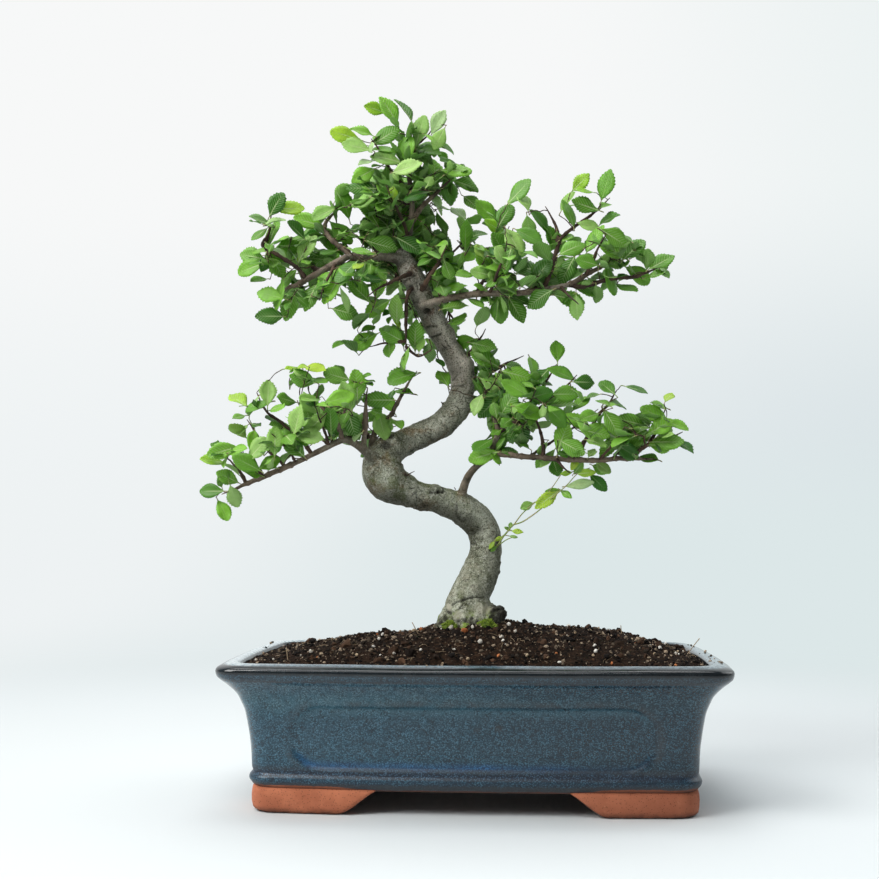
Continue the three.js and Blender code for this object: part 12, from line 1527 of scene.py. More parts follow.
        (-52.9, -0.2, 387.5, -53.5, -2.1, 388.4, -0.31, -0.92, 0.25, 0.04, 0.25, 0.97, 14.1, 7.7, 0, 0),
        (-70.8, -9.9, 372.4, -69.7, -11.5, 372.8, 0.55, -0.83, 0, -0.32, -0.22, 0.92, 12.9, 7.3, 0, 0),
        (-57.2, -24.6, 380.2, -59, -25.3, 381, -0.91, -0.36, 0.2, 0.35, -0.42, 0.83, 15.8, 7.9, 0, 0),
        (-52.4, -7.5, 377.1, -53.8, -8.8, 378.3, -0.68, -0.63, 0.38, 0.58, -0.14, 0.81, 17.9, 10.4, 0, 0),
        (-65, 1.1, 389.5, -64.4, 2.9, 389.1, 0.26, 0.89, -0.38, 0.06, 0.38, 0.92, 17.6, 10.5, 3, 0),
        (-58.9, -7.1, 391.9, -60, -8.3, 393.4, -0.53, -0.61, 0.59, 0.5, 0.34, 0.8, 13, 6.8, 0, 0),
        (-66.8, 1.3, 396.5, -67.2, 3.2, 397.2, -0.2, 0.97, 0.15, 0.51, -0.02, 0.86, 16.1, 9.5, 0, 0),
        (-78.9, -37, 374.1, -77.7, -38.6, 374.4, 0.6, -0.8, -0.05, -0.32, -0.3, 0.9, 16.2, 9.7, 0, 0),
        (-65.7, -11.8, 378.2, -65.1, -13.8, 378.5, 0.29, -0.96, -0.01, -0.45, -0.15, 0.88, 18.8, 9.9, 0, 0),
        (-62.2, -1.3, 376.2, -60.7, -2, 375.4, 0.73, -0.36, -0.58, 0.61, -0.02, 0.79, 14.2, 8, 0, 0),
        (-44.4, -2, 374.5, -44.7, 0, 375, -0.12, 0.99, 0.03, -0.58, -0.1, 0.81, 19.3, 10.1, 0, 0),
        (-53.5, -23.2, 372.8, -52.7, -24.8, 374, 0.41, -0.81, 0.42, -0.8, -0.09, 0.6, 15.4, 9.1, 0, 0),
        (-54.1, -17.5, 380.4, -55.1, -18.9, 379.8, -0.49, -0.72, -0.5, 0.11, -0.61, 0.78, 14.7, 8.8, 0, 0),
        (-65.4, 0.8, 392.3, -66.2, 0.6, 390.9, -0.41, -0.08, -0.91, -0.05, -0.99, 0.12, 13.3, 7.9, 0, 0),
        (-52.8, -15.2, 363.2, -52, -17, 363.6, 0.4, -0.92, -0.02, -0.57, -0.26, 0.78, 17.3, 10, 0, 0),
        (-65.3, -2.5, 374.9, -64.7, -0.8, 374.9, 0.35, 0.93, 0.02, 0.02, -0.03, 1, 7.9, 3.9, 0, 2),
        (-54.1, -25.8, 380.7, -55.1, -26.7, 381.4, -0.65, -0.62, 0.44, 0.5, 0.08, 0.86, 7.7, 4.3, 0, 2),
        (-62.1, -9.5, 391.5, -61.6, -10.8, 391.4, 0.38, -0.92, -0.07, 0.37, 0.08, 0.93, 12.8, 7, 0, 2),
        (-73.8, 4.3, 357.2, -74.8, 3.5, 356.3, -0.64, -0.52, -0.56, 0.01, -0.73, 0.68, 8.8, 4.8, 0, 2),
        (-55.8, -3.1, 389.2, -55.2, -4.4, 390.8, 0.27, -0.61, 0.74, -0.48, 0.59, 0.66, 10.7, 6.1, 0, 2),
        (-84.9, -13.8, 378.6, -85.4, -14.9, 379.3, -0.35, -0.78, 0.52, 0.84, 0, 0.55, 12.5, 6.8, 0, 2),
        (-53.7, 11.4, 371.9, -55, 12.2, 372.6, -0.74, 0.51, 0.45, 0.15, -0.52, 0.84, 12, 6.1, 0, 2),
        (-67, 6.9, 387.9, -65.9, 8.1, 386.6, 0.52, 0.55, -0.65, -0.58, 0.79, 0.2, 7.6, 3.8, 0, 2),
        (-65.8, 10.7, 400.6, -66.9, 11.4, 401.5, -0.69, 0.45, 0.57, 0.04, -0.76, 0.65, 11.8, 7.2, 0, 2),
        (-75.3, -2.2, 361.2, -75.2, -1.8, 362.5, 0.11, 0.28, 0.95, -0.86, -0.45, 0.23, 9.6, 4.8, 0, 2),
        (-67.6, -0.9, 397, -67.7, -2.7, 396, -0.07, -0.87, -0.5, 0.72, -0.39, 0.58, 7.3, 4.1, 0, 2),
        (-69.5, -1, 375.8, -70.5, -1.9, 376.5, -0.66, -0.6, 0.46, 0.64, -0.12, 0.76, 12, 5.9, 0, 2),
        (-65.2, -17.1, 385.6, -66.3, -18.7, 385.9, -0.58, -0.8, 0.14, 0.7, -0.39, 0.6, 11.6, 5.7, 0, 2),
        (-70, -21.2, 357.9, -68.6, -20.9, 358.6, 0.88, 0.21, 0.44, -0.42, -0.14, 0.9, 12.8, 7, 0, 2),
        (-53.2, -23, 373, -54.6, -23.3, 373.2, -0.98, -0.2, 0.07, 0.13, -0.27, 0.96, 10.6, 5.5, 0, 2),
        (-61, -3.6, 394.3, -61.5, -4.2, 395.4, -0.33, -0.44, 0.83, 0.4, 0.73, 0.55, 13, 6.8, 0, 2),
        (-54.6, 6.4, 355.5, -56.2, 5.7, 356.6, -0.78, -0.34, 0.53, 0.52, -0.82, 0.23, 12.8, 7.1, 0, 2),
        (-41.8, -22.8, 385, -41.1, -21.5, 385.7, 0.4, 0.82, 0.4, -0.23, -0.33, 0.91, 8.5, 4.4, 0, 2),
        (-67, -16.2, 384.8, -68.3, -16.2, 384.4, -0.96, 0.03, -0.29, -0.15, -0.89, 0.42, 12.7, 6.3, 0, 2),
        (-73.4, 0.3, 359.1, -72.8, -0.8, 360.3, 0.34, -0.59, 0.73, -0.7, 0.36, 0.61, 6.9, 3.6, 0, 2),
        (-49.8, 3.2, 375.9, -51.2, 4.3, 376.1, -0.77, 0.63, 0.09, 0.11, 0, 0.99, 10.5, 6.1, 0, 2),
        (-64.4, -6.8, 373.5, -64.6, -6, 374.7, -0.1, 0.58, 0.81, -0.58, -0.7, 0.42, 7, 3.5, 0, 2),
        (-63.7, -17.4, 385.6, -64.6, -16.1, 385.8, -0.56, 0.82, 0.09, -0.49, -0.42, 0.77, 11.1, 6.8, 0, 2),
        (-51.5, -21.5, 377.2, -52.7, -21.1, 377.7, -0.85, 0.31, 0.42, 0.16, -0.61, 0.77, 11.1, 5.4, 0, 2),
        (-51.6, -7, 376.9, -51.9, -8.8, 378, -0.15, -0.85, 0.51, 0.47, 0.39, 0.79, 11, 5.5, 0, 2),
        (-75.4, 8.8, 361.3, -74.9, 8, 362.1, 0.42, -0.63, 0.65, -0.55, 0.39, 0.73, 8.1, 4.4, 0, 2),
        (-58.5, 12.9, 377.7, -58.7, 13.1, 376.3, -0.15, 0.14, -0.98, -0.98, -0.15, 0.13, 10.5, 5.6, 0, 2),
        (-52.2, -20, 378.1, -52.3, -20.4, 379.2, -0.08, -0.33, 0.94, -0.07, -0.94, -0.33, 10.8, 6.1, 1, 2),
        (-66.2, 2, 396.5, -64.4, 1.5, 395.7, 0.87, -0.26, -0.42, -0.32, -0.94, -0.1, 10.6, 5.9, 0, 2),
        (-52.6, -0.1, 387.3, -53.7, 0.9, 388.9, -0.54, 0.44, 0.72, -0.05, -0.87, 0.49, 7.9, 3.8, 0, 2),
        (-47.4, 3.5, 385.5, -48.8, 2.7, 384.1, -0.67, -0.37, -0.64, -0.46, -0.48, 0.75, 11.9, 7.3, 0, 2),
        (-71.9, -9.2, 371, -71.1, -7.8, 372, 0.43, 0.73, 0.53, -0.63, -0.18, 0.76, 8.8, 4.9, 0, 2),
        (-59.7, -6.1, 391, -60.9, -5.6, 390.7, -0.9, 0.38, -0.21, -0.17, 0.14, 0.98, 11, 6.1, 0, 2),
        (-32.1, -22.3, 386.5, -31.5, -21.6, 388, 0.33, 0.4, 0.85, -0.07, -0.89, 0.45, 10.6, 6, 0, 2),
        (-64.9, -6.1, 370.4, -66.2, -4.5, 370.9, -0.62, 0.75, 0.22, 0.07, -0.23, 0.97, 11.5, 6.8, 0, 2),
        (-59.4, -17.9, 385, -60.2, -16.7, 386.4, -0.38, 0.59, 0.71, 0.52, -0.5, 0.69, 10.1, 6, 0, 2),
        (-65.4, 0.8, 392, -64.8, -1.2, 392.6, 0.28, -0.92, 0.26, 0.24, 0.33, 0.91, 10.9, 6.6, 0, 2),
        (-83.6, -21.9, 360, -82.5, -21, 360.5, 0.73, 0.6, 0.33, 0.02, -0.5, 0.87, 11.7, 6, 0, 2),
        (-42.4, -22.6, 384.2, -41.1, -23.3, 384.7, 0.85, -0.42, 0.33, -0.23, 0.28, 0.93, 7.4, 3.7, 3, 2),
        (-64.1, -7.6, 366.6, -63.1, -7.9, 366, 0.84, -0.25, -0.48, 0.39, -0.33, 0.86, 9.8, 5.1, 0, 2),
        (-53.2, -30.2, 384.6, -53.2, -30.9, 386, 0.04, -0.45, 0.89, 0.8, 0.55, 0.24, 9.3, 5.3, 0, 2),
        (-64.6, -6.2, 368.4, -65.8, -7.4, 367.5, -0.59, -0.65, -0.47, -0.04, -0.56, 0.82, 12.4, 6.4, 0, 2),
        (-50.4, 14.7, 365.8, -51.9, 14.1, 367.2, -0.69, -0.28, 0.66, 0.72, -0.2, 0.67, 9.9, 5.7, 1, 2),
        (-79.5, -28.9, 375.7, -78.4, -29.6, 376.6, 0.7, -0.45, 0.56, -0.47, 0.3, 0.83, 9.3, 4.8, 0, 2),
        (-82.1, -3.7, 385.6, -81.1, -4.5, 386.7, 0.58, -0.51, 0.64, -0.6, 0.26, 0.76, 7.3, 3.7, 0, 2),
        (-54.8, -16, 401.2, -53.9, -16.4, 400.2, 0.65, -0.28, -0.71, 0.16, -0.86, 0.49, 7.1, 3.7, 3, 2),
        (-87.3, -12.2, 379.4, -85.4, -11.7, 379.6, 0.97, 0.22, 0.12, -0.01, -0.45, 0.9, 6.6, 3.5, 0, 2),
        (-56, -17.2, 382.3, -56.4, -18.6, 383, -0.28, -0.84, 0.46, -0.64, 0.52, 0.57, 11.5, 5.8, 0, 2),
        (-61.7, -7.6, 373.2, -60.5, -8.4, 373.7, 0.78, -0.51, 0.37, -0.39, 0.08, 0.92, 6.8, 4.2, 0, 2),
        (-66.6, 1.2, 395.9, -66.1, 1.5, 397.9, 0.22, 0.14, 0.97, 0.51, -0.86, 0.01, 7.6, 3.8, 0, 2),
        (-47, 4.8, 384.6, -48.9, 3.9, 385.1, -0.88, -0.41, 0.23, 0.31, -0.14, 0.94, 11.2, 6.2, 1, 2),
        (-47.8, -13.8, 368.1, -49.3, -12.5, 367.9, -0.75, 0.65, -0.1, -0.16, -0.02, 0.99, 8.8, 5.4, 0, 2),
        (-82.7, -19.5, 377.5, -83.4, -21.1, 377.1, -0.43, -0.87, -0.22, -0.15, -0.18, 0.97, 9.3, 4.5, 0, 2),
        (-59.4, -6.7, 391.5, -59.7, -7.2, 393, -0.18, -0.35, 0.92, 0.76, 0.54, 0.35, 11.1, 6.3, 0, 2),
        (-51, 5.7, 382.2, -51.8, 6.5, 382.7, -0.69, 0.61, 0.38, -0.22, -0.68, 0.7, 9.8, 4.8, 0, 2),
        (-50.3, -3.7, 386.2, -51.3, -4, 386.9, -0.79, -0.21, 0.57, -0.09, 0.97, 0.24, 11.5, 6.3, 0, 2),
        (-61.2, -3.3, 394.7, -61.7, -1.7, 395.3, -0.27, 0.91, 0.33, 0.2, -0.28, 0.94, 7.9, 4.5, 0, 2),
        (-48.8, 8.1, 365.1, -50.2, 8, 366.4, -0.74, -0.05, 0.68, 0.59, 0.44, 0.68, 8.5, 4.4, 0, 2),
        (-67.1, -14, 381.8, -66.5, -12.6, 381.8, 0.39, 0.92, 0, 0.09, -0.04, 1, 11.5, 6.7, 0, 2),
        (-66.3, 3.7, 390.4, -64.5, 4.5, 390.6, 0.91, 0.39, 0.1, -0.2, 0.2, 0.96, 12.3, 6, 0, 2),
        (-92.9, -4.9, 379.7, -92, -4.7, 380.8, 0.63, 0.14, 0.77, -0.32, -0.85, 0.42, 9.6, 5, 0, 2),
        (-56.9, -24.7, 380.2, -56.6, -23.4, 379.3, 0.17, 0.79, -0.59, -0.72, 0.51, 0.47, 11.4, 6.9, 0, 2),
        (-62.1, -9.5, 391.5, -63.6, -9.8, 392.6, -0.8, -0.17, 0.57, 0.59, -0.09, 0.8, 6.5, 3.5, 0, 2),
        (-53.4, -0.8, 387.8, -54.5, -1.1, 387.3, -0.88, -0.29, -0.38, -0.19, -0.51, 0.84, 12.4, 6.9, 0, 2),
        (-71.1, -22.7, 354.8, -71.8, -21.2, 355.8, -0.37, 0.78, 0.5, -0.1, -0.57, 0.82, 7.4, 4.3, 0, 2),
        (-53, 11.1, 368.5, -52.2, 12.2, 369.6, 0.47, 0.64, 0.61, -0.24, -0.58, 0.78, 9.6, 5, 0, 2),
        (-82.7, -13.2, 360.7, -81.3, -12.8, 360.4, 0.93, 0.31, -0.18, 0.26, -0.24, 0.94, 12.9, 6.5, 0, 2),
        (-75.4, -2.5, 361.5, -75, -2.9, 363.2, 0.26, -0.2, 0.95, 0.24, -0.94, -0.26, 11.9, 6.3, 0, 2),
        (-67.6, -0.9, 397, -68.9, -0.8, 396.9, -0.99, 0.02, -0.12, -0.13, -0.14, 0.98, 7.1, 3.8, 0, 2),
        (-66.8, -1.4, 375.7, -67.5, -2.9, 375.6, -0.4, -0.92, -0.06, -0.16, 0.01, 0.99, 12.9, 7.6, 0, 2),
        (-65, -17.2, 385.7, -66.2, -17.1, 386.7, -0.75, 0.08, 0.66, 0.64, -0.18, 0.75, 7.9, 4.1, 1, 2),
        (-53.4, -23.1, 372.9, -54.6, -24.8, 373.6, -0.55, -0.76, 0.35, 0.26, 0.24, 0.94, 7.7, 4.4, 3, 2),
        (-60.8, -4.1, 393.7, -60.7, -4.2, 395.4, 0.05, -0.03, 1, 0.03, -1, -0.04, 7.8, 4.1, 0, 2),
        (-37.7, -22.4, 386.3, -36.7, -20.9, 386.2, 0.57, 0.82, -0.06, 0.28, -0.12, 0.95, 9, 5.2, 0, 2),
        (-66.9, 13.9, 402.9, -68.6, 14.4, 402.7, -0.96, 0.27, -0.09, 0.07, 0.54, 0.84, 12.7, 7.1, 0, 2),
        (-43.7, -1.7, 392.6, -45, -3, 392.6, -0.72, -0.7, 0.02, -0.11, 0.14, 0.98, 11.8, 6.7, 1, 2),
        (-64.6, -7.2, 373.5, -63.1, -6.2, 372.5, 0.73, 0.49, -0.48, 0.67, -0.37, 0.64, 7.5, 4.2, 1, 2),
        (-59, -8, 409.9, -58.9, -8, 408.6, 0.05, -0.01, -1, 0.48, -0.88, 0.03, 11.7, 5.7, 3, 2),
        (-64.3, -17.3, 385.7, -64.8, -17.1, 384.5, -0.39, 0.2, -0.9, 0.49, 0.87, -0.01, 8, 4.2, 0, 2),
        (-51.9, -20.4, 377.8, -53.1, -18.9, 377.8, -0.63, 0.77, 0.01, 0.04, 0.02, 1, 12.3, 7, 0, 2),
        (-48.9, -5.1, 376.1, -49.3, -6.4, 376.6, -0.3, -0.89, 0.36, -0.15, 0.41, 0.9, 8.8, 4.6, 0, 2),
    ]),
    ("shoot_crown_5", [
        (-52.7, 24.9, 338.8, -52.7, 26.9, 339.2, 0, 1, 0.01, 0.27, 0, 0.96, 17, 8.6, 0, 0),
        (-60.5, 12.5, 377.1, -61.2, 14.4, 377.5, -0.34, 0.94, 0, -0.16, -0.06, 0.99, 18.8, 10.4, 0, 0),
        (-53, 34.7, 371, -52.1, 36.5, 371.1, 0.44, 0.89, -0.13, 0.02, 0.13, 0.99, 16.1, 8.4, 0, 0),
        (-54.5, 31.3, 357.1, -55.4, 33, 356.8, -0.43, 0.83, -0.35, -0.09, 0.35, 0.93, 19.4, 9.4, 0, 0),
        (-51.6, 25.1, 366.1, -51.9, 27.1, 366.3, -0.18, 0.98, -0.09, -0.62, -0.05, 0.78, 13.7, 7.3, 0, 0),
        (-51.8, 34.1, 356.5, -52.9, 35.8, 356.7, -0.55, 0.83, -0.1, -0.07, 0.07, 1, 16.6, 8.6, 0, 0),
        (-55.7, 7.1, 358.1, -54.3, 8.5, 358.2, 0.69, 0.7, -0.17, 0.17, 0.07, 0.98, 18.4, 9.3, 0, 0),
        (-65.9, 36.4, 348.2, -65.3, 38.2, 348.2, 0.32, 0.93, -0.16, 0.01, 0.17, 0.99, 14.3, 7.8, 0, 0),
        (-47.1, 14.2, 342.3, -46.4, 16.1, 342.5, 0.34, 0.94, -0.08, 0.1, 0.05, 0.99, 16.2, 8.5, 0, 0),
        (-36.9, 18.5, 347.7, -37, 20.5, 348.3, -0.09, 0.99, 0.1, -0.2, -0.11, 0.97, 15.5, 8.6, 0, 0),
        (-63.6, 27.3, 380.6, -64, 29.2, 381.5, -0.21, 0.94, 0.27, 0, -0.28, 0.96, 14.1, 7.9, 0, 0),
        (-54.4, 24.7, 348.9, -53.6, 26.5, 349.8, 0.4, 0.89, 0.23, -0.72, 0.15, 0.68, 13, 7.2, 0, 0),
        (-66.5, 34.2, 355, -66.6, 36.1, 355.9, -0.05, 0.98, 0.21, -0.2, -0.22, 0.96, 18.8, 9.5, 0, 0),
        (-49.5, 25.3, 370, -50.6, 26.3, 369.1, -0.56, 0.51, -0.65, -0.3, 0.61, 0.73, 14.1, 7.3, 0, 0),
        (-46.3, 45.9, 341, -47, 46.9, 342.9, -0.39, 0.48, 0.79, 0.91, 0.08, 0.4, 16.6, 9, 0, 0),
        (-49.8, 23.1, 352.2, -48.7, 24.8, 352.5, 0.56, 0.83, -0.06, 0.35, -0.17, 0.92, 19, 10.7, 0, 0),
        (-46.4, 35, 375.1, -46.4, 37, 375.3, 0, 1, -0.08, 0.1, 0.08, 0.99, 17.8, 10.4, 0, 0),
        (-48, 29, 342.8, -48.3, 31, 342.8, -0.14, 0.97, -0.19, -0.83, -0.01, 0.56, 16.2, 8.2, 0, 0),
        (-47.7, 23.8, 348.3, -49.3, 24.8, 348.1, -0.79, 0.55, -0.29, -0.04, 0.42, 0.91, 12.9, 6.3, 3, 0),
        (-49, 30.6, 359.5, -48.8, 32.6, 359.6, 0.14, 0.98, -0.15, -0.18, 0.17, 0.97, 15.6, 8, 0, 0),
        (-52.2, 41.4, 367.9, -53.1, 43.2, 367.9, -0.4, 0.89, -0.22, 0.4, 0.38, 0.84, 17.1, 9.9, 0, 0),
        (-55.3, 27.8, 340.6, -54, 29.1, 341.8, 0.65, 0.63, 0.42, -0.33, -0.27, 0.91, 16, 7.7, 0, 0),
        (-48.3, 31.4, 348.9, -48.4, 32.9, 350.5, -0.03, 0.77, 0.64, -0.9, 0.26, -0.36, 17.6, 8.6, 0, 0),
        (-37.7, 35.2, 350.9, -37.8, 33.3, 351.9, -0.07, -0.94, 0.34, 0.14, 0.33, 0.93, 16.2, 9.6, 0, 0),
        (-59, 44.4, 349.8, -57.4, 45.3, 349.4, 0.8, 0.43, -0.42, 0, 0.69, 0.72, 16.1, 9.1, 0, 0),
        (-33.3, 21.3, 358.5, -33.3, 22.5, 357.3, 0.03, 0.59, -0.8, -0.33, 0.76, 0.55, 14.4, 8.3, 0, 0),
        (-62.5, 20.6, 353.8, -61.3, 22.1, 354.9, 0.56, 0.75, 0.35, -0.54, 0.01, 0.84, 17, 9.2, 0, 0),
        (-59.9, 13.2, 347.8, -58.8, 14.9, 348.6, 0.54, 0.82, 0.19, -0.09, -0.17, 0.98, 15.2, 7.4, 0, 0),
        (-53.2, 13.1, 339.3, -53, 15.1, 339.6, 0.1, 1, -0.01, -0.63, 0.07, 0.78, 17.1, 8.4, 0, 0),
        (-63, 16.8, 349.9, -62.1, 18.5, 350.5, 0.47, 0.88, 0.11, -0.04, -0.1, 0.99, 15.1, 8.9, 0, 0),
        (-51.4, 34.2, 374.9, -52, 36.1, 375.1, -0.3, 0.95, -0.12, 0.46, 0.26, 0.85, 16.2, 9.7, 0, 0),
        (-36.8, 23.2, 371.1, -36.9, 25.2, 371.6, -0.06, 1, 0.04, -0.09, -0.04, 0.99, 19.4, 11, 0, 0),
        (-74.2, 9, 365, -74.2, 11, 365.1, 0.05, 0.99, -0.14, 0.18, 0.13, 0.98, 18.5, 10.5, 3, 0),
        (-31, 17.9, 351.1, -31.5, 19.8, 351.6, -0.25, 0.97, 0.04, 0.12, -0.01, 0.99, 16.9, 9.7, 0, 0),
        (-68, 28.3, 347.5, -68.1, 29, 349.8, -0.05, 0.35, 0.94, 0.77, -0.58, 0.25, 12.5, 6.3, 0, 0),
        (-67.4, 16.7, 371.6, -66.7, 18.4, 371.3, 0.36, 0.85, -0.38, 0.09, 0.38, 0.92, 16.4, 9.6, 0, 0),
        (-53.7, 6.4, 363.6, -55.2, 7.7, 363.5, -0.74, 0.63, -0.23, -0.03, 0.3, 0.95, 13.8, 7.8, 3, 0),
        (-66.7, 35.3, 362.3, -67.2, 37.2, 362.2, -0.27, 0.93, -0.25, 0.11, 0.28, 0.95, 15.3, 9.1, 0, 0),
        (-37.4, 38.9, 354.3, -37.4, 40.9, 354.7, -0.02, 1, 0, -0.58, -0.01, 0.82, 18.2, 9.5, 0, 0),
        (-30.7, 44.7, 350.1, -32.2, 45.1, 351.7, -0.76, 0.22, 0.61, 0.6, 0.58, 0.55, 14.6, 7.9, 0, 0),
        (-56.7, 48.5, 360, -55.7, 50.2, 360.6, 0.54, 0.84, 0.1, -0.64, 0.33, 0.7, 18, 8.9, 0, 0),
        (-42.8, 45.8, 361.2, -42.5, 47.7, 361.8, 0.18, 0.98, 0.11, -0.1, -0.09, 0.99, 12.5, 6.7, 3, 0),
        (-43.4, 33.2, 346.6, -42.1, 34.6, 347.8, 0.63, 0.68, 0.37, -0.56, 0.07, 0.82, 14.1, 6.8, 0, 0),
        (-52.8, 11, 367.8, -52, 12.8, 367.7, 0.42, 0.87, -0.25, -0.05, 0.3, 0.95, 13.5, 6.7, 0, 0),
        (-57, 35.4, 345.5, -57.4, 37.3, 345.7, -0.2, 0.98, -0.07, 0.22, 0.12, 0.97, 19.4, 10.5, 3, 0),
        (-60.4, 28.5, 381, -60.6, 30.2, 380.5, -0.11, 0.88, -0.46, 0.04, 0.47, 0.88, 12.5, 6.7, 0, 0),
        (-49.1, 30.1, 370.1, -47.8, 28.7, 369.8, 0.61, -0.71, -0.35, 0.26, -0.23, 0.94, 14.7, 7.5, 0, 0),
        (-50.4, 46.2, 353.7, -50.8, 48.1, 354.4, -0.18, 0.97, 0.16, 0.12, -0.14, 0.98, 14.3, 8.3, 3, 0),
        (-63.4, 21.8, 355.4, -61.4, 21.9, 355.6, 1, 0.07, -0.06, 0, 0.66, 0.75, 14.8, 8.4, 0, 0),
        (-48.2, 31.8, 351.1, -49.2, 33, 352.8, -0.49, 0.57, 0.66, 0.63, 0.76, -0.18, 14.8, 7.4, 0, 0),
        (-40.2, 33.6, 361, -39.8, 35.1, 362.7, 0.23, 0.72, 0.66, -0.72, -0.33, 0.61, 13.6, 7.4, 0, 0),
        (-36.9, 35.9, 376.1, -38.3, 36.9, 375.2, -0.72, 0.54, -0.44, -0.26, 0.37, 0.89, 7.6, 4.4, 0, 2),
        (-65.3, 36.3, 347.9, -65, 37.5, 348.6, 0.2, 0.84, 0.51, -0.24, -0.46, 0.85, 6.8, 3.3, 3, 2),
        (-37.6, 36.5, 352.1, -35.9, 36.5, 352.5, 0.97, -0.03, 0.22, -0.23, -0.04, 0.97, 6.7, 3.8, 1, 2),
        (-63.2, 31.9, 346.9, -64.1, 31.5, 346, -0.72, -0.29, -0.63, -0.1, -0.86, 0.51, 7.8, 4.6, 0, 2),
        (-45.1, 32.6, 358.4, -43.8, 31.8, 358.7, 0.84, -0.51, 0.17, 0.13, 0.5, 0.86, 12.7, 7.7, 0, 2),
        (-47.1, 11.9, 364.5, -46.6, 13.6, 364.7, 0.29, 0.95, 0.11, -0.45, 0.04, 0.89, 8.3, 4.2, 0, 2),
        (-58.2, 41.5, 348.4, -59.5, 42.6, 348.5, -0.78, 0.62, 0.11, -0.51, -0.72, 0.47, 9.8, 5.5, 0, 2),
        (-37, 43.1, 374.7, -38.1, 44, 374.8, -0.77, 0.64, 0.06, -0.62, -0.77, 0.16, 12.1, 6.1, 0, 2),
        (-48.3, 31.5, 358, -47.3, 30.8, 359.1, 0.58, -0.44, 0.68, -0.23, 0.72, 0.65, 12.2, 6.7, 0, 2),
        (-46.4, 41, 362.8, -46.3, 42.7, 362.6, 0.07, 0.99, -0.1, -0.38, 0.12, 0.92, 7.6, 4.2, 0, 2),
        (-63.6, 38, 388.3, -63.3, 38.5, 387.3, 0.28, 0.47, -0.83, 0.33, 0.77, 0.55, 8.2, 4.1, 0, 2),
        (-66.6, 34.8, 361, -67.8, 34.9, 361.6, -0.9, 0.06, 0.43, 0.24, -0.75, 0.62, 6.5, 3.7, 0, 2),
        (-52.8, 33.1, 356.7, -51.7, 31.6, 357.4, 0.54, -0.76, 0.35, -0.35, 0.18, 0.92, 9, 5, 0, 2),
        (-38.4, 18.2, 347.5, -38.1, 20.4, 347.5, 0.12, 0.99, 0, -0.2, 0.02, 0.98, 6.6, 3.6, 0, 2),
        (-66.5, 29.7, 347.4, -68.2, 29.3, 346.9, -0.93, -0.22, -0.29, -0.25, -0.19, 0.95, 9.8, 6, 0, 2),
        (-39.4, 33.5, 350.3, -38.3, 33.3, 351.1, 0.81, -0.17, 0.56, -0.38, -0.89, 0.27, 9.9, 4.8, 0, 2),
        (-61.2, 12.8, 376.5, -61.6, 14, 375.6, -0.23, 0.76, -0.61, -0.57, -0.61, -0.55, 11.2, 6.3, 0, 2),
        (-66.1, 36.2, 349, -67.6, 35.9, 349.1, -0.97, -0.22, 0.08, -0.04, 0.51, 0.86, 10.6, 5.4, 0, 2),
        (-61.9, 55.2, 368.3, -62.6, 54.3, 367.3, -0.45, -0.6, -0.66, -0.07, -0.71, 0.7, 8.6, 5, 0, 2),
        (-44.6, 55, 372.6, -43.2, 55.6, 371.7, 0.8, 0.28, -0.54, 0.41, 0.4, 0.82, 8.7, 4.9, 0, 2),
        (-38.5, 25.9, 376.2, -39.6, 25, 375.5, -0.7, -0.57, -0.43, 0.11, -0.69, 0.72, 11.1, 6.8, 0, 2),
        (-60.5, 58.1, 356, -61.8, 57.8, 356.2, -0.95, -0.26, 0.16, 0.15, 0.04, 0.99, 10.9, 5.2, 3, 2),
        (-62.5, 27.7, 380.7, -63.4, 28.3, 380.1, -0.75, 0.43, -0.51, -0.58, -0.04, 0.81, 11.9, 6.4, 0, 2),
        (-52.8, 44.2, 365.2, -54.3, 44, 365.2, -0.99, -0.12, -0.01, 0.03, -0.36, 0.93, 11.1, 6.6, 0, 2),
        (-46.5, 53.9, 372.6, -45.8, 52.9, 372.1, 0.55, -0.75, -0.36, 0.1, -0.37, 0.92, 9.3, 5.5, 0, 2),
        (-37.2, 60.2, 348.2, -37.6, 59.6, 350.3, -0.21, -0.27, 0.94, 0.95, 0.17, 0.26, 12.8, 7, 0, 2),
        (-66.4, 34.1, 357.7, -65.5, 35, 359.1, 0.46, 0.51, 0.73, 0.14, -0.85, 0.51, 10.9, 6.6, 0, 2),
        (-44.8, 38.4, 383, -46, 39.4, 382.4, -0.7, 0.63, -0.34, -0.44, -0.01, 0.9, 8.6, 4.9, 0, 2),
        (-60, 39.5, 384, -61.4, 38.8, 383.6, -0.87, -0.44, -0.23, -0.39, 0.32, 0.87, 7.7, 4.4, 1, 2),
        (-33.3, 21, 358.8, -34.7, 21.7, 358.8, -0.89, 0.45, 0.04, 0.11, 0.12, 0.99, 9.3, 4.5, 0, 2),
        (-37.5, 37, 352.6, -38.4, 37.3, 354.2, -0.47, 0.14, 0.87, -0.21, -0.98, 0.04, 9, 5.2, 0, 2),
        (-59.4, 33.1, 345.6, -60.5, 31.4, 345.6, -0.52, -0.85, 0, -0.27, 0.17, 0.95, 10.2, 6.3, 0, 2),
        (-69.8, 42.2, 386.3, -71.4, 41.7, 386, -0.94, -0.3, -0.17, -0.21, 0.12, 0.97, 6.8, 3.8, 0, 2),
        (-58.3, 34.5, 390.5, -59.3, 34.2, 389.4, -0.68, -0.21, -0.7, -0.59, -0.41, 0.69, 12.5, 6.7, 3, 2),
        (-48.2, 31.6, 357.8, -49.8, 32.1, 358.5, -0.89, 0.26, 0.37, -0.13, -0.93, 0.34, 8.2, 4.7, 0, 2),
        (-63.4, 21.8, 355.3, -64.5, 21.8, 356.1, -0.83, -0.01, 0.56, 0.52, -0.39, 0.76, 9.4, 5.4, 0, 2),
    ]),
    ("shoot_crown_6", [
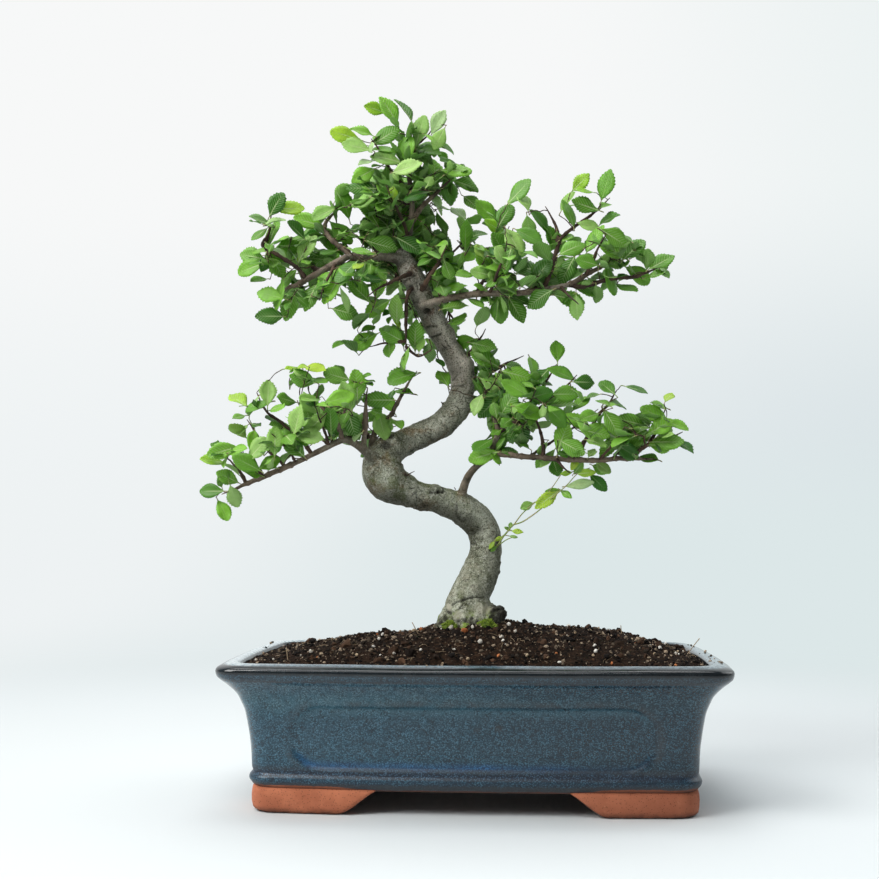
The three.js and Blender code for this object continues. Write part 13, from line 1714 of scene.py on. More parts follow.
        (-16.5, 26.5, 351.2, -17.4, 25.9, 353.2, -0.47, -0.3, 0.83, 0.6, -0.8, 0.05, 23.1, 13.4, 0, 1),
        (-7.2, 3.7, 352.8, -8.2, 3.3, 351.5, -0.48, -0.16, -0.86, -0.24, -0.92, 0.3, 22.4, 12.3, 0, 1),
        (-53, -17.4, 357.6, -51.2, -17.6, 357, 0.86, -0.1, -0.5, 0.07, -0.95, 0.31, 21.9, 11.4, 0, 1),
        (-6.2, -16, 344.4, -6.1, -16.6, 346.8, 0.02, -0.28, 0.96, 0.7, -0.68, -0.21, 21.9, 11.3, 0, 1),
        (-21.2, 0, 343.3, -21.7, 0.5, 341.8, -0.27, 0.26, -0.93, -0.12, -0.96, -0.23, 19.4, 11.5, 0, 1),
        (-44.9, 8.5, 344.6, -43, 8.9, 345.5, 0.93, 0.24, 0.27, 0.22, -0.97, 0.1, 22.8, 11.3, 0, 1),
        (-40.9, 2, 345.9, -39.9, 2.3, 348, 0.48, 0.16, 0.86, -0.24, -0.92, 0.3, 22.6, 12.4, 0, 1),
        (-43.8, 7.7, 340.3, -44.7, 7.1, 342.4, -0.47, -0.3, 0.83, 0.41, -0.91, -0.1, 19.5, 10, 0, 1),
        (-17.8, 14.7, 350.7, -16.2, 13.6, 350.6, 0.79, -0.56, -0.25, -0.2, -0.63, 0.75, 21.1, 11.7, 0, 1),
        (-22.5, 23.1, 342.9, -22, 22.4, 345.1, 0.27, -0.35, 0.9, -0.83, -0.56, 0.03, 20.3, 11.1, 0, 1),
        (-23.9, 25.9, 356.1, -25.2, 24.4, 356.7, -0.65, -0.75, 0.13, 0.7, -0.53, 0.47, 11.3, 6.7, 0, 1),
        (-32.6, 5.6, 336.5, -32.7, 6.9, 338.4, -0.04, 0.63, 0.78, 0.59, -0.61, 0.52, 11.2, 5.8, 0, 1),
        (-45.7, 3.4, 360.5, -44.2, 2.1, 361.1, 0.74, -0.65, 0.13, -0.57, -0.53, 0.62, 11, 5.3, 0, 1),
        (-26, -1.8, 339.6, -26.8, -0.3, 338.9, -0.41, 0.71, -0.57, -0.54, 0.31, 0.78, 11.1, 5.7, 0, 1),
        (-48.6, 4.6, 343.9, -47.1, 3.4, 344.2, 0.77, -0.64, -0.06, -0.32, -0.46, 0.82, 11, 6.2, 0, 1),
        (-43.1, -1.1, 362, -43.5, 0.9, 362.7, -0.2, 0.97, 0.15, 0.67, 0.03, 0.74, 17.2, 9.2, 0, 0),
        (-27.6, 10.6, 345.4, -26, 11.9, 345.8, 0.76, 0.65, 0.01, -0.12, 0.12, 0.98, 13.8, 7.9, 0, 0),
        (-54.8, 18.5, 351.7, -53.5, 16.9, 352.3, 0.61, -0.79, 0.08, 0.1, 0.18, 0.98, 16.6, 9.9, 0, 0),
        (-48.9, 4.3, 346.6, -49.2, 6.3, 347.4, -0.12, 0.98, 0.18, 0.38, -0.12, 0.92, 17.8, 9.7, 0, 0),
        (-41.1, 11.6, 334.1, -40.3, 13.4, 334.7, 0.36, 0.92, 0.12, 0.1, -0.17, 0.98, 17.3, 10.3, 0, 0),
        (-54.5, 7, 355.6, -53.4, 8.4, 355.2, 0.57, 0.7, -0.44, 0.24, 0.37, 0.9, 14.3, 7, 0, 0),
        (-35, -7.5, 369.4, -34.7, -6.4, 368.2, 0.14, 0.56, -0.82, 0.66, 0.56, 0.5, 14.7, 8.3, 0, 0),
        (-33.1, -23, 351.7, -33.1, -24.9, 351.5, -0.01, -0.95, -0.3, 0.3, -0.29, 0.91, 13, 7, 0, 0),
        (-28.1, -1.7, 321.2, -27.3, -2.3, 323.3, 0.41, -0.32, 0.85, 0.23, -0.87, -0.43, 18.8, 10.3, 0, 0),
        (-20.9, 6.3, 358.4, -22.6, 5.4, 358.3, -0.85, -0.47, -0.23, -0.4, 0.3, 0.87, 13.8, 7.6, 0, 0),
        (-23.3, 4.3, 344.8, -24.1, 3.9, 347, -0.37, -0.18, 0.91, 0.84, 0.36, 0.41, 13.1, 7.5, 0, 0),
        (-42.8, 10.4, 324.4, -42.1, 12, 325.7, 0.34, 0.82, 0.46, -0.82, 0.02, 0.57, 14.6, 8.5, 0, 0),
        (-26.5, -5.1, 360.8, -27.5, -5.4, 359.5, -0.48, -0.17, -0.86, -0.77, -0.39, 0.51, 15.9, 9.3, 0, 0),
        (-17.5, 11.3, 348.7, -17.9, 9.4, 349.3, -0.18, -0.98, 0.12, -0.26, 0.16, 0.95, 13.8, 7.8, 0, 0),
        (-38.3, 3.8, 334, -36.4, 4.3, 334.1, 0.96, 0.25, -0.12, -0.05, 0.59, 0.81, 16.8, 9.8, 0, 0),
        (-44.8, 1, 348.8, -44.3, 3, 349, 0.22, 0.97, -0.12, 0.02, 0.12, 0.99, 17.2, 8.5, 0, 0),
        (-32.2, 4.8, 342.3, -32.8, 6.6, 343.4, -0.31, 0.88, 0.35, 0.42, -0.21, 0.88, 15.9, 9.4, 0, 0),
        (-14.9, 2.7, 345.3, -15.6, 0.9, 345.9, -0.39, -0.92, 0.09, 0.03, 0.09, 1, 18.5, 10.8, 0, 0),
        (-12.6, 0.2, 337.4, -12, 2.1, 338, 0.27, 0.96, 0.12, -0.01, -0.12, 0.99, 14.4, 8.6, 0, 0),
        (-21.4, 19, 357.7, -21.6, 19.2, 360.1, -0.08, 0.09, 0.99, 0.64, 0.77, -0.02, 12.6, 6.6, 0, 0),
        (-35.4, 8.8, 358.1, -34.2, 10.3, 359, 0.58, 0.78, 0.22, -0.67, 0.32, 0.67, 16.9, 9.7, 0, 0),
        (-49, 1.1, 344.8, -49.4, 3.1, 345.2, -0.21, 0.98, 0.02, 0.41, 0.07, 0.91, 17.2, 8.7, 0, 0),
        (-48.8, 12.2, 326, -47.6, 12, 328, 0.59, -0.1, 0.8, -0.71, 0.4, 0.58, 16.5, 9.7, 0, 0),
        (-27.4, -2.2, 337.5, -26.1, -0.9, 337.1, 0.65, 0.64, -0.41, 0.44, 0.13, 0.89, 16.3, 8.6, 0, 0),
        (-17, -1.8, 328, -17.7, 0, 328.7, -0.39, 0.91, 0.14, 0.19, -0.07, 0.98, 15.2, 7.9, 0, 0),
        (-22.4, -2.8, 348, -23, -4.6, 348.9, -0.28, -0.93, 0.24, 0.84, -0.12, 0.53, 14, 7, 0, 0),
        (-29.1, -6.1, 348.3, -28.9, -8.1, 349, 0.13, -0.98, 0.17, -0.57, 0.07, 0.82, 18.9, 10.4, 0, 0),
        (-41.9, 12.2, 362.1, -40.1, 11.6, 363, 0.93, -0.29, 0.24, -0.17, 0.26, 0.95, 15.9, 8.1, 0, 0),
        (-35.7, 2.2, 333.6, -35.7, 4.2, 334.3, 0, 0.99, 0.16, -0.64, -0.12, 0.76, 13.1, 6.5, 0, 0),
        (-38.8, 4.9, 345.9, -37.5, 6.4, 346.2, 0.65, 0.76, -0.03, -0.48, 0.44, 0.76, 15.1, 8.2, 0, 0),
        (-31.2, 11.4, 364.1, -30.2, 13.1, 365, 0.47, 0.85, 0.24, -0.42, -0.03, 0.91, 18.4, 10.2, 0, 0),
        (-25.1, -15.8, 327.8, -24.8, -14.7, 328.4, 0.26, 0.85, 0.45, -0.32, -0.36, 0.87, 12.6, 7.8, 0, 2),
        (-33.2, 19.2, 360.2, -34, 18.6, 359.1, -0.59, -0.36, -0.72, 0.1, -0.92, 0.37, 12.9, 7.3, 0, 2),
        (-23.6, 0.8, 346.4, -22.5, 0.1, 346.8, 0.82, -0.48, 0.31, -0.38, -0.04, 0.93, 8.2, 4, 0, 2),
        (-23.5, 24, 356.7, -23.1, 25.3, 357.1, 0.29, 0.9, 0.33, 0.19, -0.39, 0.9, 9.2, 5, 3, 2),
        (-19, 8.6, 356.2, -21, 9.1, 356.3, -0.97, 0.24, 0.03, -0.03, -0.26, 0.97, 6.6, 3.5, 3, 2),
        (-26.6, -3.8, 347.8, -26.4, -5.2, 347.7, 0.18, -0.98, -0.07, 0, -0.07, 1, 8, 4.7, 0, 2),
        (-25.7, 8.4, 345.1, -24.9, 9.4, 346.4, 0.44, 0.58, 0.69, -0.52, -0.46, 0.72, 10.6, 6.3, 0, 2),
        (-18.2, -5, 324.6, -17, -3.9, 324.6, 0.75, 0.66, -0.01, 0.1, -0.11, 0.99, 8.2, 4.9, 0, 2),
        (-22, 23.3, 343.9, -21.1, 21.9, 343.7, 0.56, -0.81, -0.16, -0.74, -0.58, 0.35, 10.7, 5.8, 0, 2),
        (-24, -5.8, 335.8, -21.9, -5.9, 335.3, 0.97, -0.07, -0.22, 0.18, -0.39, 0.91, 7, 3.7, 0, 2),
        (-31.2, 17.9, 350.9, -29.8, 17.9, 351.3, 0.96, -0.02, 0.29, -0.28, -0.37, 0.88, 8.5, 5.2, 0, 2),
        (-14.7, -0.4, 332.7, -15.2, -0.5, 334, -0.39, -0.08, 0.92, 0.69, -0.69, 0.23, 8.4, 4.5, 0, 2),
        (-12, -3, 336.7, -11.2, -3.5, 337.9, 0.5, -0.32, 0.8, -0.84, 0.02, 0.54, 8.2, 5.1, 1, 2),
        (-31.8, 12.9, 365.3, -30.4, 12.4, 364.9, 0.91, -0.33, -0.27, 0.25, -0.1, 0.96, 9.2, 5.1, 0, 2),
        (-44.1, 4.8, 360.9, -43.1, 6.5, 360.7, 0.49, 0.86, -0.11, -0.04, 0.16, 0.99, 8.9, 5.1, 0, 2),
        (-29.3, -0.5, 337.2, -28.3, 0.3, 336.5, 0.66, 0.52, -0.54, 0.67, -0.1, 0.73, 10.7, 5.2, 3, 2),
        (-26.9, -26.5, 347.5, -28.2, -26.6, 347, -0.94, -0.06, -0.32, -0.23, -0.6, 0.77, 8.6, 5, 0, 2),
        (-17.2, 23.6, 350.2, -18.2, 24.1, 351.4, -0.62, 0.3, 0.73, 0.75, -0.05, 0.66, 12.1, 6.9, 0, 2),
        (-35.4, -7.3, 369.9, -35.2, -8.6, 369.5, 0.16, -0.95, -0.27, -0.76, -0.3, 0.58, 9.3, 4.5, 0, 2),
        (-27, -5.2, 361.2, -25.7, -4.3, 361.1, 0.82, 0.58, -0.06, -0.25, 0.44, 0.86, 7.7, 3.9, 0, 2),
        (-25.9, -24.7, 348.4, -26.4, -23.6, 348.1, -0.4, 0.89, -0.22, -0.42, 0.03, 0.9, 7.3, 4.3, 0, 2),
        (-49.1, 12.3, 365.5, -49, 10.9, 366.1, 0.06, -0.91, 0.42, 0.05, 0.42, 0.9, 8.9, 4.8, 0, 2),
        (-31.3, -6.9, 366, -32.6, -7.9, 364.7, -0.61, -0.47, -0.64, -0.48, -0.42, 0.77, 8.7, 5.1, 0, 2),
        (-31.4, 4.2, 342.1, -32.2, 3.1, 343.2, -0.46, -0.62, 0.63, 0.89, -0.27, 0.38, 9.2, 5.5, 0, 2),
        (-16.4, 11.2, 353.1, -17.1, 11, 351.8, -0.48, -0.11, -0.87, -0.55, -0.74, 0.39, 8, 4.8, 0, 2),
        (-23.4, 4.3, 344.7, -21.7, 3.7, 344.6, 0.94, -0.32, -0.07, -0.09, -0.45, 0.89, 11.1, 5.9, 0, 2),
        (-37.5, 7.6, 358.8, -37, 8.4, 357.8, 0.36, 0.6, -0.71, 0.93, -0.15, 0.34, 7.6, 4.6, 3, 2),
        (-44.5, -1.9, 361.8, -44.2, 0, 362.3, 0.13, 0.96, 0.26, -0.66, -0.11, 0.74, 11.5, 5.9, 0, 2),
        (-17.6, 18.9, 350.4, -18.8, 19.5, 350.1, -0.9, 0.4, -0.18, -0.34, -0.38, 0.86, 8.2, 4.5, 0, 2),
        (-32.8, 16.1, 363.2, -32, 17.5, 363.3, 0.52, 0.85, 0.09, 0.22, -0.24, 0.95, 11.4, 5.7, 0, 2),
        (-28.9, -1.5, 331.4, -27.6, -1.1, 331, 0.9, 0.28, -0.33, 0.41, -0.3, 0.86, 9.3, 5.3, 0, 2),
        (-18.3, 9.8, 349.8, -17.2, 9.8, 348.3, 0.57, 0.01, -0.82, 0.8, 0.19, 0.56, 10.2, 6.2, 0, 2),
        (-32.6, 14.7, 367.3, -33, 12.9, 366.3, -0.21, -0.86, -0.47, -0.06, -0.47, 0.88, 7, 4.1, 0, 2),
        (-17.8, 9.8, 354.9, -17.9, 8.3, 355.7, -0.01, -0.87, 0.5, 0.44, 0.44, 0.78, 7, 3.4, 0, 2),
        (-17.3, -2.6, 327.1, -17.8, -1.9, 328, -0.4, 0.59, 0.7, 0.43, -0.56, 0.71, 6.6, 3.5, 0, 2),
    ]),
    ("shoot_crown_7", [
        (-53.4, 62.9, 334.1, -52.2, 64.5, 334.4, 0.59, 0.81, -0.05, -0.63, 0.49, 0.6, 14.8, 7.8, 3, 0),
        (-27.6, 66.3, 327.4, -28.5, 68.1, 328.1, -0.45, 0.89, 0.12, 0.22, -0.01, 0.97, 16, 9.2, 0, 0),
        (-33.7, 46.1, 343.4, -34.3, 48, 343.7, -0.27, 0.96, -0.04, 0.27, 0.12, 0.96, 18.2, 10.8, 0, 0),
        (-46.1, 54.2, 337, -46.3, 55.6, 338.8, -0.09, 0.71, 0.7, 0.9, -0.24, 0.36, 13, 7.6, 0, 0),
        (-31.8, 66.5, 336.5, -32.9, 68, 336.3, -0.55, 0.77, -0.32, 0.08, 0.43, 0.9, 16.1, 8, 0, 0),
        (-39, 57, 342.2, -40, 58.3, 343.8, -0.47, 0.64, 0.61, 0.76, -0.06, 0.65, 14.8, 8.5, 0, 0),
        (-36.3, 47.6, 326.6, -37.1, 49.3, 327.8, -0.37, 0.83, 0.42, 0.9, 0.2, 0.39, 16.5, 8.9, 0, 0),
        (-31, 60.1, 340.7, -31.2, 62.1, 341.6, -0.11, 0.97, 0.2, 0.1, -0.19, 0.98, 15.5, 7.8, 0, 0),
        (-41.9, 73.2, 346.8, -41.2, 74.8, 346.3, 0.32, 0.83, -0.46, 0.24, 0.4, 0.88, 14.6, 8.1, 3, 0),
        (-55.4, 72.3, 346.2, -55.8, 74.2, 346.2, -0.17, 0.97, -0.2, 0.25, 0.23, 0.94, 13.7, 8, 0, 0),
        (-24.6, 65.3, 313.5, -26.4, 64.4, 313.9, -0.9, -0.43, 0, -0.19, 0.41, 0.89, 16.4, 9.8, 3, 0),
        (-22.5, 58.9, 316.6, -24.5, 59, 316.8, -0.99, 0.08, -0.15, -0.07, 0.6, 0.8, 18.3, 10.7, 0, 0),
        (-18.5, 51.5, 327.3, -18.8, 53.4, 327.7, -0.13, 0.99, -0.02, 0.12, 0.03, 0.99, 16.8, 9.7, 0, 0),
        (-25.2, 35.8, 328.1, -26.4, 37.4, 328.4, -0.63, 0.77, -0.06, 0.26, 0.28, 0.92, 16.8, 8.7, 0, 0),
        (-13.2, 46.2, 335.5, -14.7, 47.3, 336.8, -0.73, 0.52, 0.44, 0.68, 0.63, 0.39, 14.3, 7.4, 0, 0),
        (-51.4, 43.1, 328.1, -51.9, 45.1, 328.6, -0.22, 0.97, 0.06, -0.36, -0.14, 0.92, 16.4, 9.3, 0, 0),
        (-43.1, 72.8, 334.9, -43, 74.3, 333.9, 0.05, 0.71, -0.7, 0.35, 0.65, 0.68, 15.8, 8.8, 0, 0),
        (-39.2, 65, 329, -39.3, 66.9, 329.8, -0.06, 0.98, 0.2, -0.36, -0.21, 0.91, 17.4, 10, 0, 0),
        (-28.5, 60.5, 342.3, -27.8, 62.3, 342.4, 0.38, 0.91, -0.15, 0.05, 0.14, 0.99, 17.6, 9, 0, 0),
        (-20, 46.2, 319.3, -20.8, 47.8, 320.6, -0.42, 0.79, 0.45, 0.28, -0.36, 0.89, 15.9, 8.2, 0, 0),
        (-34.4, 67.4, 328.1, -33.8, 69.1, 327.8, 0.33, 0.87, -0.37, -0.12, 0.42, 0.9, 16.5, 9, 0, 0),
        (-41.5, 56.2, 324.9, -40.2, 57.6, 325.8, 0.65, 0.72, 0.24, 0.1, -0.4, 0.91, 15.5, 7.6, 0, 0),
        (-35.7, 51.2, 305.4, -35, 53, 306.1, 0.34, 0.93, 0.12, -0.61, 0.12, 0.78, 16, 9, 3, 0),
        (-37, 43.2, 327.1, -38.6, 44.1, 326.8, -0.82, 0.43, -0.39, -0.12, 0.53, 0.84, 13.4, 7.6, 0, 0),
        (-32.1, 52.7, 332.7, -33.5, 53.7, 333.9, -0.73, 0.53, 0.43, 0.59, 0.2, 0.78, 15.5, 8.4, 0, 0),
        (-43.7, 39.8, 323.4, -43.2, 41.8, 324.1, 0.2, 0.97, 0.13, -0.07, -0.12, 0.99, 13.4, 6.9, 0, 0),
        (-35.3, 30.5, 336.2, -34.9, 32.4, 336.2, 0.21, 0.96, -0.2, -0.7, 0.29, 0.65, 16.2, 7.8, 0, 0),
        (-34.8, 36.5, 344.4, -34.1, 38.4, 344.6, 0.34, 0.94, -0.09, -0.4, 0.23, 0.89, 17.5, 10.1, 0, 0),
        (-42, 35.9, 329.7, -41.7, 37.9, 329.7, 0.16, 0.96, -0.21, -0.25, 0.25, 0.94, 13.5, 7.2, 0, 0),
        (-35.4, 27.9, 334.4, -34.7, 29.8, 335.1, 0.33, 0.93, 0.17, 0.03, -0.19, 0.98, 17.4, 10.4, 0, 0),
        (-40.3, 53.3, 325.3, -38.9, 54.7, 325.6, 0.72, 0.69, -0.06, -0.3, 0.39, 0.87, 16.1, 8.6, 0, 0),
        (-46.8, 71.1, 344, -46.1, 72.6, 343.3, 0.35, 0.77, -0.53, 0.46, 0.35, 0.82, 13.4, 6.9, 0, 0),
        (-50.7, 67.1, 334.2, -52.1, 68.6, 334.7, -0.69, 0.72, 0.01, 0.31, 0.28, 0.91, 12.8, 6.8, 0, 0),
        (-33.5, 70.4, 310.1, -31.8, 70.9, 309.6, 0.84, 0.27, -0.47, 0.13, 0.74, 0.66, 15.5, 9, 0, 0),
        (-40.9, 65.6, 333.7, -39.9, 67.2, 334.9, 0.5, 0.78, 0.37, -0.64, 0.06, 0.76, 18, 10, 0, 0),
        (-44.2, 44.5, 311.6, -43.4, 46.3, 311.8, 0.39, 0.92, -0.08, -0.24, 0.18, 0.95, 19.2, 10.9, 0, 0),
        (-42.3, 65.4, 324.4, -43.8, 66.7, 324.6, -0.77, 0.63, -0.11, 0.02, 0.19, 0.98, 16.8, 9, 0, 0),
        (-30.2, 65.1, 335.1, -29.3, 66.8, 335.9, 0.49, 0.86, 0.17, 0.07, -0.23, 0.97, 18.8, 11.1, 0, 0),
        (-34.4, 67.4, 337.5, -35.8, 68.8, 338.2, -0.7, 0.7, 0.16, 0.35, 0.14, 0.93, 14.6, 7.2, 0, 0),
        (-36.7, 67.6, 315.2, -37.7, 68.5, 317.1, -0.46, 0.46, 0.76, 0.88, 0.13, 0.45, 13.9, 6.8, 0, 0),
        (-35.4, 70.3, 337.5, -35.3, 72.1, 337, 0.06, 0.9, -0.44, 0.02, 0.44, 0.9, 15.7, 7.8, 0, 0),
        (-31.2, 60.3, 322.4, -32, 62.2, 323, -0.41, 0.91, 0.09, 0.08, -0.06, 0.99, 12.5, 6.3, 3, 0),
        (-39.6, 61, 350.4, -40.9, 62.5, 350.9, -0.67, 0.74, 0.03, 0.05, 0.01, 1, 14.7, 7.5, 0, 0),
        (-31.8, 66.3, 336.6, -30.9, 66.3, 337.7, 0.61, 0, 0.79, -0.78, 0.19, 0.6, 8.2, 5, 0, 2),
        (-30.5, 25.2, 336.6, -29.9, 27.1, 336.4, 0.3, 0.95, -0.06, 0.49, -0.1, 0.87, 9.3, 5, 0, 2),
        (-13.2, 45.6, 335, -14.2, 46.5, 335.8, -0.62, 0.61, 0.49, 0.1, -0.57, 0.82, 11.9, 6.2, 0, 2),
    ]),
    ("shoot_crown_8", [
        (-19.4, 43.6, 309.9, -20, 45.5, 310.3, -0.3, 0.95, -0.01, -0.08, -0.02, 1, 16.1, 8.1, 0, 0),
        (-31.6, 44.2, 310.4, -30.9, 42.4, 310.7, 0.37, -0.92, -0.09, 0.21, -0.01, 0.98, 17.2, 8.8, 0, 0),
        (-41.2, 22.3, 310.3, -41.1, 23.8, 312.1, 0.06, 0.72, 0.69, -0.25, -0.66, 0.71, 13.3, 7.7, 0, 0),
        (-18.8, 50.1, 299.9, -19.5, 51.5, 301.5, -0.33, 0.7, 0.63, -0.06, -0.68, 0.73, 18.6, 9.1, 0, 0),
        (-24.2, 23.9, 301.9, -23.8, 25.9, 302.1, 0.2, 0.97, -0.13, 0.15, 0.1, 0.98, 19.2, 10.1, 0, 0),
        (-21.4, 39.1, 304.2, -23, 40.4, 304.4, -0.76, 0.65, -0.07, 0.12, 0.25, 0.96, 13.2, 7, 0, 0),
        (-20.1, 24.4, 324, -18.7, 25.7, 325, 0.69, 0.67, 0.27, -0.59, 0.31, 0.75, 18.9, 11.3, 0, 0),
        (-26.2, 23.5, 299.8, -24.9, 24.9, 300.7, 0.65, 0.71, 0.26, -0.38, 0.01, 0.92, 18.8, 10.2, 0, 0),
        (-21.6, 52.4, 303, -23, 53.8, 303.4, -0.71, 0.7, 0.04, -0.09, -0.15, 0.99, 14, 7.7, 3, 0),
        (-23.3, 35.4, 294.3, -22.5, 37.2, 294.7, 0.42, 0.91, 0.02, -0.27, 0.11, 0.96, 13.8, 7.3, 0, 0),
        (-25.4, 35.2, 307.6, -25.9, 37.2, 307.9, -0.26, 0.96, -0.03, 0.35, 0.13, 0.93, 14.8, 8.8, 0, 0),
        (-12.2, 31.1, 324.6, -12.7, 33, 325.2, -0.26, 0.96, 0.1, 0.07, -0.09, 0.99, 15.9, 8.4, 3, 0),
        (-16.4, 46, 290.9, -17.6, 44.4, 291.5, -0.61, -0.79, 0.1, -0.39, 0.4, 0.83, 15.7, 8.9, 0, 0),
        (-34.6, 28.5, 326.5, -33.2, 28.7, 325.5, 0.69, 0.09, -0.72, 0.68, 0.26, 0.69, 15.5, 8.3, 0, 0),
        (-22.2, 31.2, 297.2, -21.6, 33, 297.7, 0.34, 0.94, 0.05, -0.24, 0.03, 0.97, 13.8, 6.7, 0, 0),
        (-21.2, 14.9, 306.5, -22.6, 16.4, 306.7, -0.69, 0.72, -0.07, 0.37, 0.44, 0.82, 18.1, 8.9, 0, 0),
        (-16.4, 31.9, 310.8, -16.1, 33.9, 311.4, 0.13, 0.99, 0.07, 0.08, -0.08, 0.99, 19.3, 11, 3, 0),
        (-41.4, 39.1, 295.1, -41.2, 41, 296.1, 0.11, 0.96, 0.27, -0.99, 0.09, 0.1, 17.1, 8.3, 0, 0),
        (-16.8, 34.3, 327.5, -18.1, 35.8, 327.7, -0.64, 0.76, -0.08, -0.31, -0.16, 0.94, 14, 7.6, 0, 0),
        (-26.8, 26.4, 314.1, -26.9, 28.4, 314.5, -0.04, 1, -0.02, -0.1, 0.02, 1, 16.4, 8.4, 0, 0),
        (-43.8, 24.8, 307.7, -42.2, 25.5, 307.2, 0.83, 0.37, -0.42, 0.14, 0.59, 0.79, 14.3, 7.6, 0, 0),
        (-32.4, 32.5, 321.1, -32.9, 34.5, 321.6, -0.25, 0.97, 0, -0.35, -0.09, 0.93, 18.3, 9, 0, 0),
        (-25.5, 43.3, 319.7, -26.3, 44.9, 319.1, -0.39, 0.78, -0.48, -0.41, 0.32, 0.85, 17.9, 9.2, 0, 0),
        (-27.4, 31.5, 288.5, -28, 32.6, 290.4, -0.32, 0.56, 0.77, 0.74, 0.65, -0.16, 15, 7.2, 0, 0),
        (-19.4, 39.8, 308.3, -19.8, 41.7, 308.2, -0.2, 0.95, -0.25, 0.44, 0.31, 0.84, 18, 9.5, 0, 0),
        (-2.7, 11.3, 293.6, -2.6, 13.3, 294, 0.08, 1, -0.03, -0.1, 0.04, 0.99, 17.5, 9.5, 0, 0),
        (-25.3, 15.1, 317.4, -24.3, 16.4, 319, 0.49, 0.65, 0.58, -0.85, 0.18, 0.5, 13.7, 6.7, 0, 0),
        (-32, 27.1, 313.5, -34, 27, 313.9, -1, -0.05, 0, -0.02, 0.42, 0.91, 15.6, 8.4, 0, 0),
        (-31, 28.5, 325.4, -31, 30.5, 326.2, 0.02, 0.97, 0.23, 0.37, -0.23, 0.9, 14.8, 8, 0, 0),
        (-25.3, 27.4, 292, -23.8, 28.6, 292.9, 0.77, 0.58, 0.27, -0.41, 0.13, 0.9, 13.4, 7.2, 0, 0),
        (-28.4, 32.6, 309.9, -27.7, 34.4, 309.8, 0.35, 0.9, -0.26, 0.02, 0.27, 0.96, 18.3, 9.8, 0, 0),
        (-16.7, 14.3, 301.7, -16.8, 16.1, 301.4, -0.08, 0.93, -0.35, 0.21, 0.36, 0.91, 12.9, 7, 0, 0),
        (-34.7, 12.9, 321.9, -35.8, 14.4, 322.9, -0.56, 0.77, 0.3, 0.73, 0.28, 0.63, 16.1, 8.9, 0, 0),
        (-33, 19, 304.8, -34.7, 19.7, 304.4, -0.86, 0.31, -0.4, 0.12, 0.89, 0.44, 13.9, 7.4, 0, 0),
        (-21.4, 16, 296.3, -19.6, 16.9, 296.7, 0.9, 0.44, -0.01, 0.01, 0, 1, 14.8, 7.7, 0, 0),
        (-22, 17, 293, -22.8, 18.9, 293.7, -0.39, 0.91, 0.14, 0.25, -0.04, 0.97, 18.8, 10.8, 0, 0),
        (-20.2, 30.5, 319.1, -20.7, 32.4, 320.1, -0.25, 0.92, 0.31, -0.16, -0.35, 0.92, 18.2, 10.5, 0, 0),
        (-20.8, 23.1, 308.3, -21.5, 23.4, 310.5, -0.32, 0.16, 0.93, 0.19, 0.98, -0.1, 18.8, 10.5, 0, 0),
        (-35, 8.5, 302.4, -34.5, 10.5, 302.7, 0.28, 0.96, -0.01, -0.03, 0.02, 1, 16.1, 7.8, 0, 0),
        (-43, 36.8, 299.9, -42.9, 35.4, 298.8, 0.06, -0.78, -0.62, -0.19, -0.62, 0.77, 7.1, 3.5, 0, 2),
        (-36.3, 7.3, 304.2, -36.8, 8.2, 302.7, -0.29, 0.47, -0.83, -0.9, 0.16, 0.4, 11.8, 6.7, 0, 2),
        (-19.3, 32.6, 307.8, -17.9, 33.8, 308.7, 0.69, 0.58, 0.44, -0.26, -0.37, 0.89, 7.9, 4.1, 0, 2),
        (-44.7, 38.6, 309.2, -44.7, 40.4, 308.1, 0.03, 0.86, -0.51, -0.61, 0.42, 0.67, 12.2, 7.5, 0, 2),
        (-24.3, 16.4, 319.1, -23.3, 15.3, 318.6, 0.65, -0.67, -0.36, 0.36, -0.15, 0.92, 10.7, 6.6, 0, 2),
        (-36, 7.6, 303.9, -36.6, 7.4, 301.9, -0.29, -0.08, -0.95, -0.56, -0.79, 0.24, 12.4, 6.8, 0, 2),
    ]),
    ("shoot_hanging_1", [
        (-35.2, -10.7, 268.6, -37.1, -11.2, 268.5, -0.93, -0.24, -0.27, 0.08, -0.87, 0.49, 21.9, 12.7, 0, 1),
        (-61.1, -14.2, 295, -62.7, -14.6, 294.4, -0.84, -0.21, -0.5, 0.16, -0.98, 0.14, 21.9, 10.8, 0, 1),
        (-39.4, -6.9, 280.7, -39.4, -7.4, 283, 0.02, -0.28, 0.96, -0.37, -0.89, -0.25, 22, 11.9, 0, 1),
        (-50.9, -10.4, 296.7, -50.9, -10.9, 299.1, 0.02, -0.28, 0.96, -0.68, -0.71, -0.19, 22, 12.5, 0, 1),
        (-44.1, -13.2, 286.8, -45.8, -14, 288.1, -0.81, -0.38, 0.45, 0.38, -0.92, -0.1, 19.3, 11.2, 0, 1),
        (-56.1, -9.8, 291.9, -56, -10.9, 290.6, 0.04, -0.58, -0.82, -0.56, -0.69, 0.46, 15.3, 8.8, 0, 1),
        (-41.6, -18.9, 286, -42.1, -19.6, 284.5, -0.22, -0.31, -0.92, -0.75, -0.55, 0.36, 17, 9.5, 0, 1),
        (-29.2, -21.5, 289.1, -29.3, -20.2, 287.9, -0.04, 0.63, -0.78, 0.41, 0.72, 0.56, 16.4, 9.2, 0, 1),
        (-37.6, -8.2, 254.1, -39.5, -8, 255, -0.96, 0.11, 0.27, 0.17, -0.55, 0.82, 16.4, 9.7, 0, 1),
        (-75.6, -15, 279.8, -76.6, -16.4, 281.2, -0.49, -0.73, 0.48, 0.19, 0.45, 0.87, 15.3, 8.7, 0, 1),
        (-65.1, -33.3, 304.8, -66.5, -32, 304.5, -0.7, 0.64, -0.32, -0.16, 0.3, 0.94, 17.9, 10.5, 0, 1),
